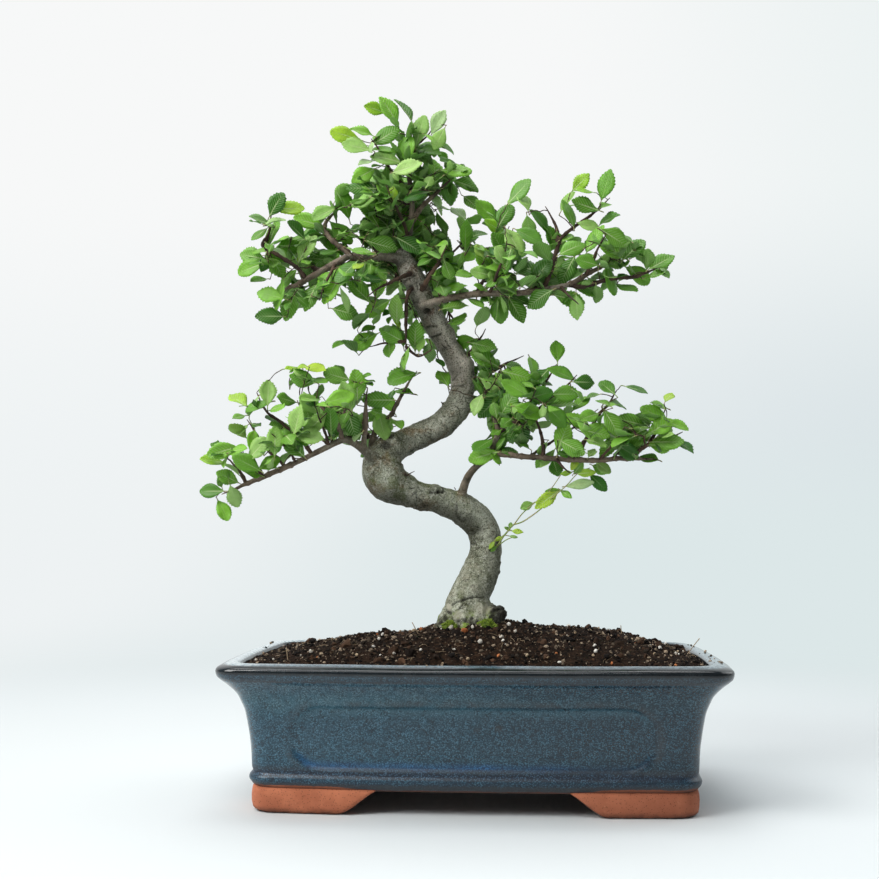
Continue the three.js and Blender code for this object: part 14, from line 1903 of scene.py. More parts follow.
        (-74.5, -22, 292.9, -73.4, -20.6, 294.1, 0.58, 0.7, 0.42, 0.12, -0.58, 0.8, 13.5, 6.8, 0, 1),
        (-46.4, -7.9, 283.5, -46.9, -7.7, 285.8, -0.26, 0.1, 0.96, 0.84, -0.47, 0.28, 19.1, 11.1, 0, 1),
        (-79.1, -14.2, 289.1, -80.4, -15.6, 289, -0.65, -0.72, -0.24, 0.04, -0.36, 0.93, 16.1, 9, 0, 1),
        (-36.1, -21.1, 278.5, -35.8, -19.8, 280.4, 0.15, 0.64, 0.75, -0.48, -0.62, 0.62, 13.4, 6.6, 0, 1),
        (-41.8, -2.3, 313.4, -41.7, -3.5, 312.2, 0.04, -0.63, -0.78, -0.91, -0.35, 0.23, 16.3, 9.6, 0, 1),
        (-27.1, -2.5, 279.9, -26, -3.7, 279.2, 0.55, -0.61, -0.57, 0.32, -0.47, 0.82, 10.8, 5.4, 0, 1),
        (-75, -26.9, 294.4, -74.3, -25.5, 296.2, 0.32, 0.66, 0.68, -0.53, -0.47, 0.7, 10.7, 6, 0, 1),
        (-51.8, -12, 258.7, -52.4, -13.3, 257.7, -0.32, -0.66, -0.68, -0.54, -0.46, 0.7, 10.7, 6.2, 0, 1),
        (-28.2, -16.5, 282, -28.7, -15.3, 283.9, -0.23, 0.61, 0.75, 0.7, -0.44, 0.57, 10.8, 5.2, 0, 1),
        (-67, -12.5, 298.5, -66.2, -13.9, 300.1, 0.41, -0.71, 0.57, -0.59, 0.26, 0.76, 10.8, 6.2, 0, 1),
        (-46, -22.8, 277.3, -46.1, -21.3, 276.4, -0.05, 0.75, -0.66, 0.77, 0.45, 0.45, 10.7, 5.2, 0, 1),
        (-54.8, 2.5, 311.2, -55.1, 1.2, 310, -0.15, -0.64, -0.75, -0.66, -0.51, 0.56, 11, 5.6, 0, 1),
        (-65.4, -25.3, 309.1, -63.6, -25.8, 309.8, 0.89, -0.25, 0.37, -0.38, 0.01, 0.92, 9.8, 6, 0, 2),
        (-59.8, -14, 291.4, -59.4, -13.2, 292.4, 0.35, 0.57, 0.74, -0.59, -0.48, 0.65, 9, 4.4, 0, 2),
        (-50.6, 0.7, 311.6, -51, 1.9, 311.1, -0.26, 0.88, -0.41, -0.22, 0.36, 0.91, 9.4, 5, 0, 2),
        (-69.3, -14.4, 287.3, -70.2, -15.9, 287.9, -0.52, -0.79, 0.32, 0.14, 0.29, 0.95, 7.9, 3.9, 0, 2),
        (-60.4, -14, 293.2, -59.6, -15.3, 293.9, 0.45, -0.78, 0.43, 0.14, 0.53, 0.84, 9.7, 5, 0, 2),
        (-44.3, -13.5, 286.8, -42.7, -12.5, 286.5, 0.83, 0.54, -0.15, 0.07, 0.18, 0.98, 11.6, 7, 0, 2),
        (-68.9, -13, 286, -69.9, -12, 286.4, -0.68, 0.67, 0.31, -0.01, -0.44, 0.9, 12.8, 7.1, 0, 2),
        (-47.6, -13, 296, -48.6, -12.5, 297.7, -0.48, 0.25, 0.84, 0.5, -0.71, 0.49, 8.2, 4.5, 1, 2),
        (-63.8, -35.2, 307.4, -63.5, -33.7, 307.4, 0.15, 0.99, 0.01, 0.15, -0.04, 0.99, 10.3, 5.8, 0, 2),
        (-67.7, -12.7, 290.3, -67.8, -14, 291.4, -0.05, -0.73, 0.68, 0.34, 0.63, 0.7, 6.6, 4.1, 0, 2),
        (-71.7, -18.9, 290.3, -71.2, -20.4, 290, 0.34, -0.92, -0.18, -0.6, -0.36, 0.71, 9.7, 5.5, 0, 2),
        (-28.4, -16.7, 282, -29.2, -15.1, 282.9, -0.38, 0.8, 0.47, 0.42, -0.3, 0.86, 11.1, 6.3, 0, 2),
        (55.5, -16.8, 193.5, 57, -17.2, 193.7, 0.95, -0.28, 0.15, -0.3, -0.95, 0.05, 19.2, 6.1, 2, 1),
        (54.6, -11.5, 192.3, 53.4, -12.1, 191.4, -0.76, -0.34, -0.56, 0.22, -0.94, 0.27, 19.2, 7.8, 1, 1),
        (56.3, -10.8, 191.3, 54.8, -11.4, 191.3, -0.92, -0.39, 0, 0.39, -0.91, 0.11, 10.2, 3.6, 0, 1),
        (39, -6.7, 184.4, 37.6, -7.3, 183.8, -0.87, -0.36, -0.34, 0.3, -0.93, 0.21, 9.4, 5.3, 3, 1),
        (52.8, -15.1, 192.7, 54.1, -15.5, 191.8, 0.79, -0.23, -0.56, -0.09, -0.96, 0.27, 9.5, 4.2, 0, 1),
        (70.6, -19.2, 217.3, 69.2, -19.8, 216.9, -0.9, -0.37, -0.23, 0.34, -0.92, 0.18, 12.7, 4.5, 1, 1),
        (66.7, -20.2, 214.4, 66, -20.6, 213.1, -0.45, -0.29, -0.84, 0.05, -0.95, 0.3, 10.8, 4.2, 1, 1),
        (63.8, -17.6, 203.4, 62.3, -18.3, 203.1, -0.91, -0.38, -0.18, 0.35, -0.92, 0.17, 8.2, 3.2, 1, 1),
        (61.9, -18.5, 200.6, 62.8, -19.1, 201.8, 0.59, -0.36, 0.72, -0.29, -0.93, -0.22, 10.1, 5.2, 3, 1),
        (63.1, -19.9, 201.6, 64.6, -20.3, 201.7, 0.96, -0.28, 0.08, -0.28, -0.96, 0.08, 12.1, 4.8, 1, 1),
        (72.9, -17.2, 208.1, 74.3, -17.6, 207.5, 0.9, -0.24, -0.36, -0.17, -0.96, 0.22, 11.5, 7.8, 0, 1),
        (71.8, -17.8, 203, 72.9, -18.2, 201.8, 0.66, -0.23, -0.71, -0.02, -0.96, 0.29, 15.7, 7.7, 0, 1),
        (75.6, -18.2, 210.3, 76.8, -18.6, 209.4, 0.76, -0.23, -0.61, -0.07, -0.96, 0.28, 12, 6.5, 3, 1),
        (52.6, -15.4, 219.5, 51.6, -15.9, 218.3, -0.6, -0.31, -0.74, 0.13, -0.95, 0.3, 16.5, 5.5, 3, 1),
        (49.4, -12.9, 213.9, 49.8, -13.3, 212.4, 0.27, -0.24, -0.93, 0.17, -0.94, 0.29, 12.7, 8.5, 0, 1),
        (46.4, -9, 215.8, 45.5, -9.5, 214.6, -0.58, -0.31, -0.75, 0.12, -0.95, 0.3, 10.7, 5.9, 0, 1),
        (21.9, -1.9, 165.7, 22.1, -2.5, 167.1, 0.17, -0.4, 0.9, -0.18, -0.91, -0.37, 4.5, 2.8, 3, 1),
        (23.4, -0.7, 165.8, 22.1, -1.4, 166.5, -0.8, -0.42, 0.42, 0.44, -0.9, -0.06, 4.3, 2.1, 3, 1),
        (21.2, -5.1, 166, 22.8, -5.6, 165.9, 0.96, -0.26, -0.11, -0.25, -0.96, 0.15, 8.2, 3.3, 1, 1),
        (19.3, -2.9, 162.8, 20.8, -3.4, 162.6, 0.96, -0.26, -0.13, -0.24, -0.96, 0.15, 6.5, 2, 3, 1),
        (18.8, 1.6, 163.4, 17.5, 1.1, 162.6, -0.8, -0.35, -0.48, 0.25, -0.93, 0.25, 7.1, 2.3, 1, 1),
        (13.2, -0.7, 160.7, 12.3, -1.2, 159.4, -0.55, -0.3, -0.78, 0.1, -0.95, 0.3, 6.9, 2.6, 1, 1),
        (14.7, -0.4, 157.2, 13.6, -0.9, 156.2, -0.68, -0.32, -0.66, 0.17, -0.94, 0.29, 5.6, 2.4, 3, 1),
    ]),
    ("shoot_left_back_1", [
        (-108.8, 42.2, 254.7, -108.6, 43.9, 254.2, 0.1, 0.9, -0.43, 0.06, 0.43, 0.9, 19.4, 10.7, 0, 0),
        (-93.3, 32.2, 245.4, -92.6, 34.1, 245.5, 0.33, 0.93, -0.15, -0.09, 0.19, 0.98, 19.4, 10.1, 0, 0),
        (-97.4, 43.8, 260.3, -97.5, 45.8, 260.8, -0.04, 1, 0.06, -0.12, -0.06, 0.99, 13, 7.7, 0, 0),
        (-93.2, 50.3, 238.8, -95.1, 50.5, 240, -0.91, 0.12, 0.39, 0.37, 0.65, 0.66, 17, 8.5, 0, 0),
        (-106.9, 29.3, 245.4, -106, 31, 245.9, 0.48, 0.87, 0.07, 0.06, -0.11, 0.99, 13.3, 7.1, 0, 0),
        (-116.9, 58.6, 255.9, -117.9, 60.1, 257.1, -0.48, 0.78, 0.4, 0.64, 0, 0.77, 19.3, 11, 0, 0),
        (-87.4, 43.7, 243.2, -88.8, 44.7, 242.6, -0.7, 0.48, -0.53, -0.45, 0.28, 0.85, 15.4, 8.1, 0, 0),
        (-104.5, 44.9, 250.5, -105.2, 46.7, 250.2, -0.35, 0.88, -0.32, 0.08, 0.37, 0.93, 16, 9.3, 0, 0),
        (-80.9, 47.6, 262.9, -80.1, 49.3, 262.5, 0.38, 0.84, -0.39, 0.14, 0.36, 0.92, 17.3, 9.4, 0, 0),
        (-109.8, 45.5, 251.9, -108.2, 46.6, 251.5, 0.77, 0.51, -0.37, 0.39, 0.08, 0.92, 19.3, 11, 0, 0),
        (-90, 40, 251.5, -90.2, 41.8, 251, -0.11, 0.89, -0.43, -0.45, 0.34, 0.82, 12.7, 6.3, 0, 0),
        (-96.3, 47.4, 235.5, -96.7, 49.3, 235.9, -0.21, 0.98, 0, 0.29, 0.06, 0.95, 18.5, 10.6, 0, 0),
        (-107.1, 65.2, 261.2, -106.1, 65.8, 260, 0.51, 0.29, -0.81, 0.42, 0.74, 0.53, 15.7, 9, 3, 0),
        (-107.5, 37.1, 255.1, -105.8, 38.1, 255.2, 0.86, 0.5, -0.13, -0.31, 0.7, 0.65, 15.6, 7.6, 0, 0),
        (-92, 25.6, 252.5, -92.5, 27.4, 252.2, -0.25, 0.9, -0.34, 0.16, 0.39, 0.91, 14.9, 7.5, 0, 0),
        (-88.9, 30.1, 237.5, -89.4, 32, 237.7, -0.28, 0.96, -0.06, 0.02, 0.07, 1, 13.3, 7.9, 0, 0),
        (-100.2, 34.8, 251.2, -101, 36.6, 252.2, -0.41, 0.87, 0.28, 0.15, -0.24, 0.96, 15.9, 9.3, 0, 0),
        (-80.3, 38.4, 240, -81.2, 40.3, 240.4, -0.42, 0.91, -0.04, -0.06, 0.02, 1, 16.4, 8.8, 0, 0),
        (-103, 30.4, 250.3, -103, 32.4, 250.8, 0, 1, 0.01, -0.14, -0.01, 0.99, 12.6, 6.3, 3, 0),
        (-87.1, 38.2, 259.4, -87, 40.2, 259.6, 0.02, 1, -0.07, -0.15, 0.08, 0.99, 17.7, 9.2, 0, 0),
        (-98.9, 51.9, 247.5, -100.1, 50.2, 247.8, -0.58, -0.81, -0.06, -0.11, 0, 0.99, 16.4, 9, 0, 0),
        (-92.9, 51.4, 237.4, -93.9, 53.1, 238.2, -0.49, 0.85, 0.16, 0.54, 0.15, 0.83, 13.4, 7, 0, 0),
        (-89.3, 42.4, 264.7, -89.4, 44.3, 264.7, -0.05, 0.97, -0.22, -0.27, 0.2, 0.94, 19.2, 9.9, 0, 0),
        (-109.4, 36.8, 244.6, -108.5, 38.4, 244.4, 0.48, 0.82, -0.3, 0.07, 0.31, 0.95, 13.6, 7.3, 3, 0),
        (-100.6, 44.8, 251.7, -100.6, 46.8, 252.5, 0.03, 0.98, 0.2, -0.68, -0.13, 0.73, 12.9, 6.4, 0, 0),
        (-77.8, 51, 257.8, -79.2, 52.4, 258.4, -0.7, 0.71, 0.09, -0.12, -0.25, 0.96, 16.7, 8.8, 0, 0),
        (-92.7, 48.8, 233.7, -91.4, 50.3, 234.6, 0.65, 0.73, 0.22, -0.69, 0.44, 0.57, 16.1, 9.5, 0, 0),
        (-86.1, 43.8, 232.3, -86.8, 45.7, 232.5, -0.36, 0.93, -0.11, 0.6, 0.32, 0.74, 15.6, 8.8, 0, 0),
        (-110, 55.6, 249.9, -108.5, 55.3, 251.5, 0.76, -0.15, 0.63, -0.24, 0.83, 0.5, 15.9, 8.7, 0, 0),
        (-95.4, 55.9, 256.8, -96.4, 57.6, 256.7, -0.48, 0.85, -0.24, -0.04, 0.25, 0.97, 18.7, 9.1, 0, 0),
        (-78.9, 49.4, 244.3, -80, 51, 244.6, -0.58, 0.81, -0.07, 0.37, 0.34, 0.87, 13.4, 6.5, 0, 0),
        (-74.7, 43, 260.6, -75.3, 44.9, 260.8, -0.28, 0.95, -0.09, 0.08, 0.12, 0.99, 13.8, 7.8, 0, 0),
        (-92.3, 44.1, 270.1, -92.6, 45.7, 269.3, -0.15, 0.79, -0.6, 0.1, 0.62, 0.78, 19.2, 10.6, 0, 0),
        (-110.7, 49.8, 246.7, -112, 51.3, 247.2, -0.69, 0.72, 0.05, 0.41, 0.33, 0.85, 14.6, 8.2, 0, 0),
        (-105, 60.7, 245.3, -104.3, 62.6, 245.6, 0.33, 0.94, -0.05, 0.11, 0.01, 0.99, 15.4, 8.7, 0, 0),
        (-96.5, 27.4, 226.9, -96.9, 29.1, 228.2, -0.21, 0.86, 0.46, -0.27, -0.5, 0.82, 17.3, 8.8, 0, 0),
        (-96.5, 65.7, 240.7, -98.4, 66.4, 241.5, -0.92, 0.33, 0.22, 0.39, 0.7, 0.59, 14.4, 8.2, 0, 0),
        (-81, 46.2, 246.3, -80.6, 48.2, 247.1, 0.23, 0.95, 0.19, 0.05, -0.21, 0.98, 14.4, 7.5, 0, 0),
        (-104.2, 40.6, 240.3, -104.3, 42.6, 241.1, -0.01, 0.98, 0.2, -0.78, -0.13, 0.61, 15.3, 7.5, 0, 0),
        (-115.6, 65.9, 246.3, -113.9, 66.6, 247.4, 0.86, 0.35, 0.38, -0.43, 0.1, 0.89, 15.4, 8.7, 0, 0),
        (-96.1, 57.7, 248.1, -95.6, 59.6, 248.1, 0.21, 0.95, -0.21, -0.09, 0.24, 0.97, 16.6, 9.1, 0, 0),
        (-92.8, 44.8, 243.8, -94.3, 45.1, 243.3, -0.94, 0.14, -0.31, -0.3, 0.08, 0.95, 11.4, 5.5, 0, 2),
        (-104.9, 60.3, 245.8, -103.9, 61.6, 246.1, 0.63, 0.77, 0.15, 0.07, -0.25, 0.97, 12.1, 5.9, 0, 2),
        (-100.2, 52.4, 249.9, -99, 52.6, 250.5, 0.88, 0.15, 0.45, -0.43, -0.15, 0.89, 9.4, 5.8, 0, 2),
        (-108.6, 38, 244, -108.4, 39.2, 244.3, 0.15, 0.96, 0.24, -0.08, -0.23, 0.97, 7.2, 4.4, 0, 2),
        (-104.5, 40.5, 240.6, -103.3, 40.2, 240.6, 0.97, -0.24, 0.04, -0.18, -0.59, 0.79, 7.7, 4.2, 0, 2),
        (-98.1, 53.1, 252.7, -96.7, 54.6, 253.1, 0.68, 0.7, 0.2, -0.17, -0.12, 0.98, 10.7, 6.3, 3, 2),
        (-87.6, 38.5, 257.7, -86.2, 39.7, 258.2, 0.72, 0.62, 0.3, -0.28, -0.13, 0.95, 9.1, 5, 0, 2),
        (-96.8, 54.2, 254.4, -96.4, 54.2, 256.5, 0.22, -0.03, 0.98, 0.97, -0.07, -0.22, 12.4, 7.7, 0, 2),
        (-91.1, 25.8, 252, -92.4, 25.5, 251, -0.8, -0.18, -0.58, -0.6, 0.24, 0.76, 7.4, 4.2, 0, 2),
        (-111.3, 61.4, 251, -112.1, 60.5, 250.3, -0.59, -0.65, -0.47, -0.27, -0.39, 0.88, 6.8, 3.8, 0, 2),
        (-107.2, 29.8, 245.2, -106.2, 31.2, 245.6, 0.61, 0.77, 0.21, 0.13, -0.35, 0.93, 10, 6, 1, 2),
        (-108, 57.5, 253.3, -108.4, 58.5, 251.5, -0.23, 0.44, -0.87, -0.89, 0.28, 0.37, 7.4, 3.8, 3, 2),
        (-91, 42, 245.7, -90.1, 43.4, 246.5, 0.47, 0.78, 0.41, 0.34, -0.59, 0.73, 6.6, 3.5, 3, 2),
        (-108, 46.5, 248.4, -109.1, 45.9, 247.4, -0.68, -0.36, -0.64, -0.61, -0.2, 0.76, 8.9, 4.4, 0, 2),
        (-90, 41.4, 242.6, -88.4, 41.4, 242.2, 0.96, 0.01, -0.28, 0.21, -0.7, 0.68, 6.7, 3.6, 0, 2),
        (-89, 41.8, 264.3, -89.4, 42.8, 263.4, -0.26, 0.72, -0.64, -0.85, 0.15, 0.51, 9, 4.5, 0, 2),
        (-104.4, 53.2, 252.2, -103.6, 51.9, 253.5, 0.39, -0.66, 0.64, -0.24, 0.6, 0.76, 9.6, 5.9, 0, 2),
        (-108.5, 33.1, 244.6, -107, 34.2, 243.4, 0.68, 0.53, -0.51, 0.32, 0.42, 0.85, 7.2, 3.7, 0, 2),
        (-115.7, 58.9, 256.1, -116.8, 59.7, 256.1, -0.82, 0.57, 0, -0.01, -0.01, 1, 11.1, 6.1, 0, 2),
        (-85.3, 46, 264.3, -85.6, 47.3, 263.8, -0.19, 0.91, -0.37, -0.01, 0.38, 0.93, 8.5, 5.1, 0, 2),
        (-104.1, 55.4, 251, -103.6, 55.8, 249.3, 0.3, 0.19, -0.94, -0.06, -0.98, -0.21, 7.2, 4.3, 3, 2),
        (-88.1, 39.6, 262.5, -87, 40.4, 263.6, 0.59, 0.46, 0.67, 0.02, -0.84, 0.55, 7.6, 4.3, 0, 2),
        (-100.3, 44.5, 253.5, -99.1, 44.4, 254, 0.92, -0.06, 0.4, -0.4, -0.21, 0.89, 9, 5.4, 0, 2),
        (-85.5, 27.9, 247.6, -85.6, 28.3, 249.2, -0.05, 0.25, 0.97, 0.68, -0.7, 0.22, 8.2, 4.7, 0, 2),
        (-90.4, 40.9, 249.1, -90.6, 39.1, 249.9, -0.1, -0.92, 0.38, -0.62, 0.35, 0.7, 6.7, 3.6, 0, 2),
        (-106.6, 36.9, 254.6, -106.2, 35.7, 254.5, 0.35, -0.93, -0.12, -0.53, -0.3, 0.79, 7.6, 3.8, 0, 2),
        (-109.8, 59.4, 256.3, -110.5, 60.7, 256.4, -0.45, 0.89, 0.06, 0.19, 0.03, 0.98, 10.3, 5, 0, 2),
        (-97.6, 55.4, 249, -98.2, 56.8, 249.2, -0.37, 0.93, 0.07, 0.58, 0.17, 0.8, 8.1, 4.4, 0, 2),
        (-100, 34.7, 251, -98.5, 34.4, 251, 0.97, -0.24, 0.03, -0.18, -0.64, 0.75, 7.9, 4.5, 0, 2),
        (-92.9, 46, 242.9, -91.9, 46.6, 242.1, 0.73, 0.39, -0.57, 0.69, -0.46, 0.56, 12, 6.8, 0, 2),
        (-78.5, 49.3, 259.5, -76.8, 48.7, 258.8, 0.88, -0.3, -0.37, 0.36, -0.07, 0.93, 10.8, 5.9, 0, 2),
        (-106.4, 29.4, 246.1, -107.4, 30.8, 245.4, -0.56, 0.73, -0.39, -0.43, 0.15, 0.89, 10.9, 5.8, 0, 2),
        (-84.8, 46.2, 264.2, -84.4, 47.4, 264.3, 0.33, 0.94, 0.13, 0.25, -0.22, 0.94, 10.9, 6.4, 0, 2),
        (-96.1, 59.2, 246.7, -97.7, 59.7, 245.5, -0.76, 0.26, -0.59, -0.65, -0.35, 0.68, 12.2, 7.3, 0, 2),
        (-97.2, 53.8, 253.8, -98.4, 54.7, 254.2, -0.78, 0.57, 0.26, 0.31, -0.01, 0.95, 9.9, 5.9, 0, 2),
    ]),
    ("shoot_left_back_2", [
        (-87.2, 11.6, 230.1, -88, 13.2, 231.4, -0.41, 0.8, 0.43, 0.55, -0.16, 0.82, 13.7, 7.1, 0, 0),
        (-76.1, 28.1, 230, -75.1, 29.7, 231, 0.5, 0.81, 0.31, -0.44, -0.07, 0.9, 13.2, 7.1, 0, 0),
        (-59.8, 16.7, 225.3, -60.3, 18.2, 224.6, -0.26, 0.76, -0.59, -0.05, 0.6, 0.8, 13.3, 7, 3, 0),
        (-75, 4.5, 241.6, -75.7, 6.2, 241.3, -0.38, 0.84, -0.39, 0.46, 0.53, 0.71, 14.8, 8.1, 0, 0),
        (-82.5, -0.6, 232.7, -82.7, 1.4, 233, -0.1, 0.99, -0.07, 0.32, 0.1, 0.94, 13, 6.5, 0, 0),
        (-65.5, 20.8, 228.1, -65.6, 22.7, 228.2, -0.02, 0.99, -0.16, 0.19, 0.17, 0.97, 15.8, 8.9, 0, 0),
        (-93, 26.7, 235.7, -92, 28.4, 235.7, 0.49, 0.84, -0.23, -0.44, 0.47, 0.77, 17.2, 10.2, 0, 0),
        (-77.9, -5, 233.9, -79.1, -3.4, 234.2, -0.6, 0.8, -0.04, -0.24, -0.13, 0.96, 15.8, 8, 0, 0),
        (-106.7, 4.3, 238.4, -106.1, 6.2, 238.8, 0.31, 0.95, 0.02, 0.01, -0.03, 1, 16.6, 9.8, 0, 0),
        (-92.5, 1.6, 236.2, -93, 3.6, 236.5, -0.25, 0.97, -0.06, 0.08, 0.08, 0.99, 13.5, 7.8, 0, 0),
        (-57.8, 17.8, 238, -59, 19.4, 238.5, -0.6, 0.8, 0.06, 0.5, 0.32, 0.8, 18.5, 9.7, 0, 0),
        (-79.9, 8.8, 226.2, -79.6, 10.5, 227.7, 0.14, 0.82, 0.56, -0.68, -0.33, 0.65, 12.6, 6.9, 0, 0),
        (-82.9, 28.6, 244.6, -83.4, 28.9, 243.1, -0.27, 0.15, -0.95, 0.6, 0.8, -0.04, 17.6, 9, 0, 0),
        (-81.8, 14.6, 223.2, -81.4, 16.5, 223.7, 0.17, 0.98, 0.04, 0.21, -0.07, 0.97, 17.4, 9.9, 0, 0),
        (-77, 14.9, 239.7, -77.9, 16.7, 240.1, -0.43, 0.9, 0, -0.06, -0.03, 1, 15, 7.3, 0, 0),
        (-52.8, 10.9, 219.5, -54.2, 12.1, 219.5, -0.74, 0.64, -0.2, -0.01, 0.28, 0.96, 13.3, 6.5, 0, 0),
        (-71.1, 13.2, 223, -72.2, 14.9, 223.5, -0.51, 0.86, 0.03, 0.34, 0.17, 0.93, 14.6, 8.6, 0, 0),
        (-74, 5.4, 231.7, -74.2, 7.4, 232, -0.12, 0.99, -0.05, 0.36, 0.09, 0.93, 15.4, 8.6, 0, 0),
        (-56.5, 18.7, 220.9, -56.8, 20.7, 221.1, -0.12, 0.99, -0.1, -0.01, 0.1, 0.99, 19, 10.5, 0, 0),
        (-86.7, 26.2, 231.6, -87.4, 27.8, 232.9, -0.35, 0.83, 0.44, 0.54, -0.21, 0.81, 19.1, 10.8, 3, 0),
        (-66.9, 8.7, 223.8, -66.1, 10.5, 224.2, 0.39, 0.92, 0.02, -0.53, 0.21, 0.82, 15.7, 8.4, 0, 0),
        (-64.7, 18.7, 219, -66.5, 19.6, 219.1, -0.88, 0.45, -0.12, -0.37, -0.52, 0.77, 14.7, 7.5, 0, 0),
        (-68, 19.4, 219.5, -67.3, 21.2, 220.4, 0.38, 0.9, 0.23, -0.57, 0.03, 0.82, 16.2, 8.4, 0, 0),
        (-107.3, -3.9, 224.1, -108, -2.2, 225.3, -0.36, 0.85, 0.38, 0.66, -0.06, 0.75, 19.1, 10.1, 0, 0),
        (-101.5, 19.4, 227.2, -100.9, 21.3, 227.5, 0.29, 0.96, -0.04, 0.16, 0, 0.99, 16.8, 9.2, 0, 0),
        (-65, 12.6, 229.9, -64.1, 14.4, 230.5, 0.44, 0.89, 0.1, -0.24, 0.01, 0.97, 15.1, 8.9, 0, 0),
        (-69.3, 20.7, 247.6, -69.7, 22.6, 247.6, -0.22, 0.95, -0.23, -0.13, 0.2, 0.97, 15.3, 8.4, 0, 0),
        (-70.2, 3.4, 229.2, -69.5, 4, 227.8, 0.34, 0.3, -0.89, 0.58, 0.68, 0.45, 19, 11.1, 0, 0),
        (-105.4, 3.9, 240.4, -106.3, 5.8, 241, -0.41, 0.91, 0.09, 0.12, -0.04, 0.99, 17.6, 9.5, 0, 0),
        (-82.9, 27.3, 227.9, -83.3, 28.9, 229.5, -0.2, 0.79, 0.58, 0.96, 0.06, 0.26, 15.3, 8.2, 0, 0),
        (-83.5, 39.6, 234.7, -81.5, 40, 235, 0.98, 0.19, -0.04, 0.01, 0.16, 0.99, 16.4, 9.8, 0, 0),
        (-70.7, 0.3, 226.8, -70.5, 2.2, 226.7, 0.1, 0.95, -0.3, -0.06, 0.3, 0.95, 19.3, 11.5, 0, 0),
        (-51, 12, 236.5, -52.9, 12.2, 237.5, -0.94, 0.06, 0.34, 0.34, 0.23, 0.91, 17.8, 8.8, 0, 0),
        (-81.5, 29, 241.6, -82.1, 27.8, 242.1, -0.44, -0.84, 0.32, 0.46, 0.1, 0.88, 8.1, 4.7, 0, 2),
        (-84.8, 32.1, 237, -85.5, 33, 237.2, -0.61, 0.79, 0.11, 0.02, -0.12, 0.99, 11, 6.2, 0, 2),
        (-65.1, 12.6, 229.9, -65.6, 13.6, 231.4, -0.31, 0.52, 0.79, 0.86, -0.2, 0.47, 11.5, 6.4, 1, 2),
        (-92.6, 1.5, 236.3, -92, 2.6, 237.1, 0.39, 0.75, 0.53, 0.08, -0.61, 0.79, 12.6, 6.4, 0, 2),
        (-71.3, 19.7, 246.1, -70.7, 21.5, 245.9, 0.33, 0.94, -0.07, -0.19, 0.14, 0.97, 8.9, 4.3, 0, 2),
        (-101.7, 1.5, 243.2, -101.2, 3.4, 242.5, 0.21, 0.93, -0.31, 0.19, 0.28, 0.94, 9.2, 5.1, 0, 2),
        (-88.5, 26.4, 250.3, -88.1, 25.3, 251.1, 0.28, -0.78, 0.56, -0.13, 0.55, 0.83, 10.5, 5.3, 0, 2),
        (-80.1, 7.8, 229.7, -81, 8.2, 230.9, -0.57, 0.28, 0.77, 0.62, -0.47, 0.63, 10.9, 5.5, 0, 2),
        (-75.5, 5.7, 236.8, -76.3, 6.8, 236.6, -0.63, 0.77, -0.1, -0.51, -0.32, 0.8, 7.1, 3.9, 0, 2),
        (-94.2, 32.5, 246.1, -94.7, 31.9, 244.8, -0.34, -0.43, -0.84, 0.22, -0.9, 0.37, 9.9, 4.7, 0, 2),
        (-105.5, 4, 240.4, -106.7, 5.7, 240.2, -0.59, 0.8, -0.08, -0.22, -0.06, 0.97, 12.4, 6.5, 0, 2),
        (-75.2, 5.2, 238.1, -77, 4.7, 239.2, -0.84, -0.22, 0.5, 0.48, 0.12, 0.87, 10, 5.8, 3, 2),
        (-83.2, -1.6, 233, -83.5, -0.6, 233.9, -0.19, 0.72, 0.67, 0.14, -0.65, 0.74, 11.7, 6.2, 0, 2),
        (-84.2, -4.5, 233.7, -83.5, -4, 234.8, 0.47, 0.37, 0.8, -0.49, -0.64, 0.59, 6.8, 3.8, 0, 2),
        (-63.4, 13.7, 231.9, -63.2, 15.5, 231.4, 0.09, 0.97, -0.24, 0.09, 0.23, 0.97, 8.5, 5.2, 0, 2),
        (-72.7, 4.7, 230.9, -74.3, 4.1, 230.4, -0.92, -0.32, -0.23, -0.14, -0.29, 0.95, 8.7, 4.5, 0, 2),
    ]),
    ("shoot_left_lower_1", [
        (-92, -64.8, 242, -90.2, -64.4, 243, 0.93, 0.24, 0.27, 0.17, -0.95, 0.26, 20.5, 10.6, 0, 1),
        (-76, -37.8, 259.7, -77.8, -38.5, 260.6, -0.91, -0.33, 0.23, 0.34, -0.94, -0.01, 18.5, 10.9, 0, 1),
        (-92.3, -54.9, 235.5, -93.7, -55.5, 237.2, -0.68, -0.3, 0.67, 0.3, -0.95, -0.12, 17.9, 10.6, 0, 1),
        (-87.8, -48.6, 221.6, -87.8, -49.2, 223.9, 0.02, -0.28, 0.96, -0.47, -0.85, -0.24, 20.8, 12, 0, 1),
        (-95.1, -52.2, 256.1, -97, -52.7, 257, -0.93, -0.28, 0.24, 0.29, -0.96, 0, 18, 10.7, 0, 1),
        (-108.6, -36.1, 268.6, -107, -37.4, 268.8, 0.77, -0.64, -0.06, -0.38, -0.53, 0.76, 18.2, 8.7, 1, 1),
        (-109.3, -42.8, 245.1, -110.6, -44.3, 245.8, -0.65, -0.75, 0.13, 0.71, -0.54, 0.45, 15.5, 8.9, 0, 1),
        (-100.2, -28.9, 246.6, -99.8, -30.4, 248.3, 0.24, -0.73, 0.64, -0.68, 0.35, 0.65, 15.7, 7.5, 0, 1),
        (-100, -59.4, 266, -101.5, -58.2, 266.5, -0.77, 0.64, 0.06, -0.24, -0.37, 0.9, 18, 10.2, 1, 1),
        (-73.8, -55.7, 236, -74.3, -56.3, 238.3, -0.24, -0.29, 0.93, 0.25, -0.94, -0.23, 20.6, 10.2, 0, 1),
        (-104.4, -39.9, 259.8, -102.9, -41.2, 260.1, 0.77, -0.64, -0.06, -0.27, -0.4, 0.87, 15.5, 7.9, 0, 1),
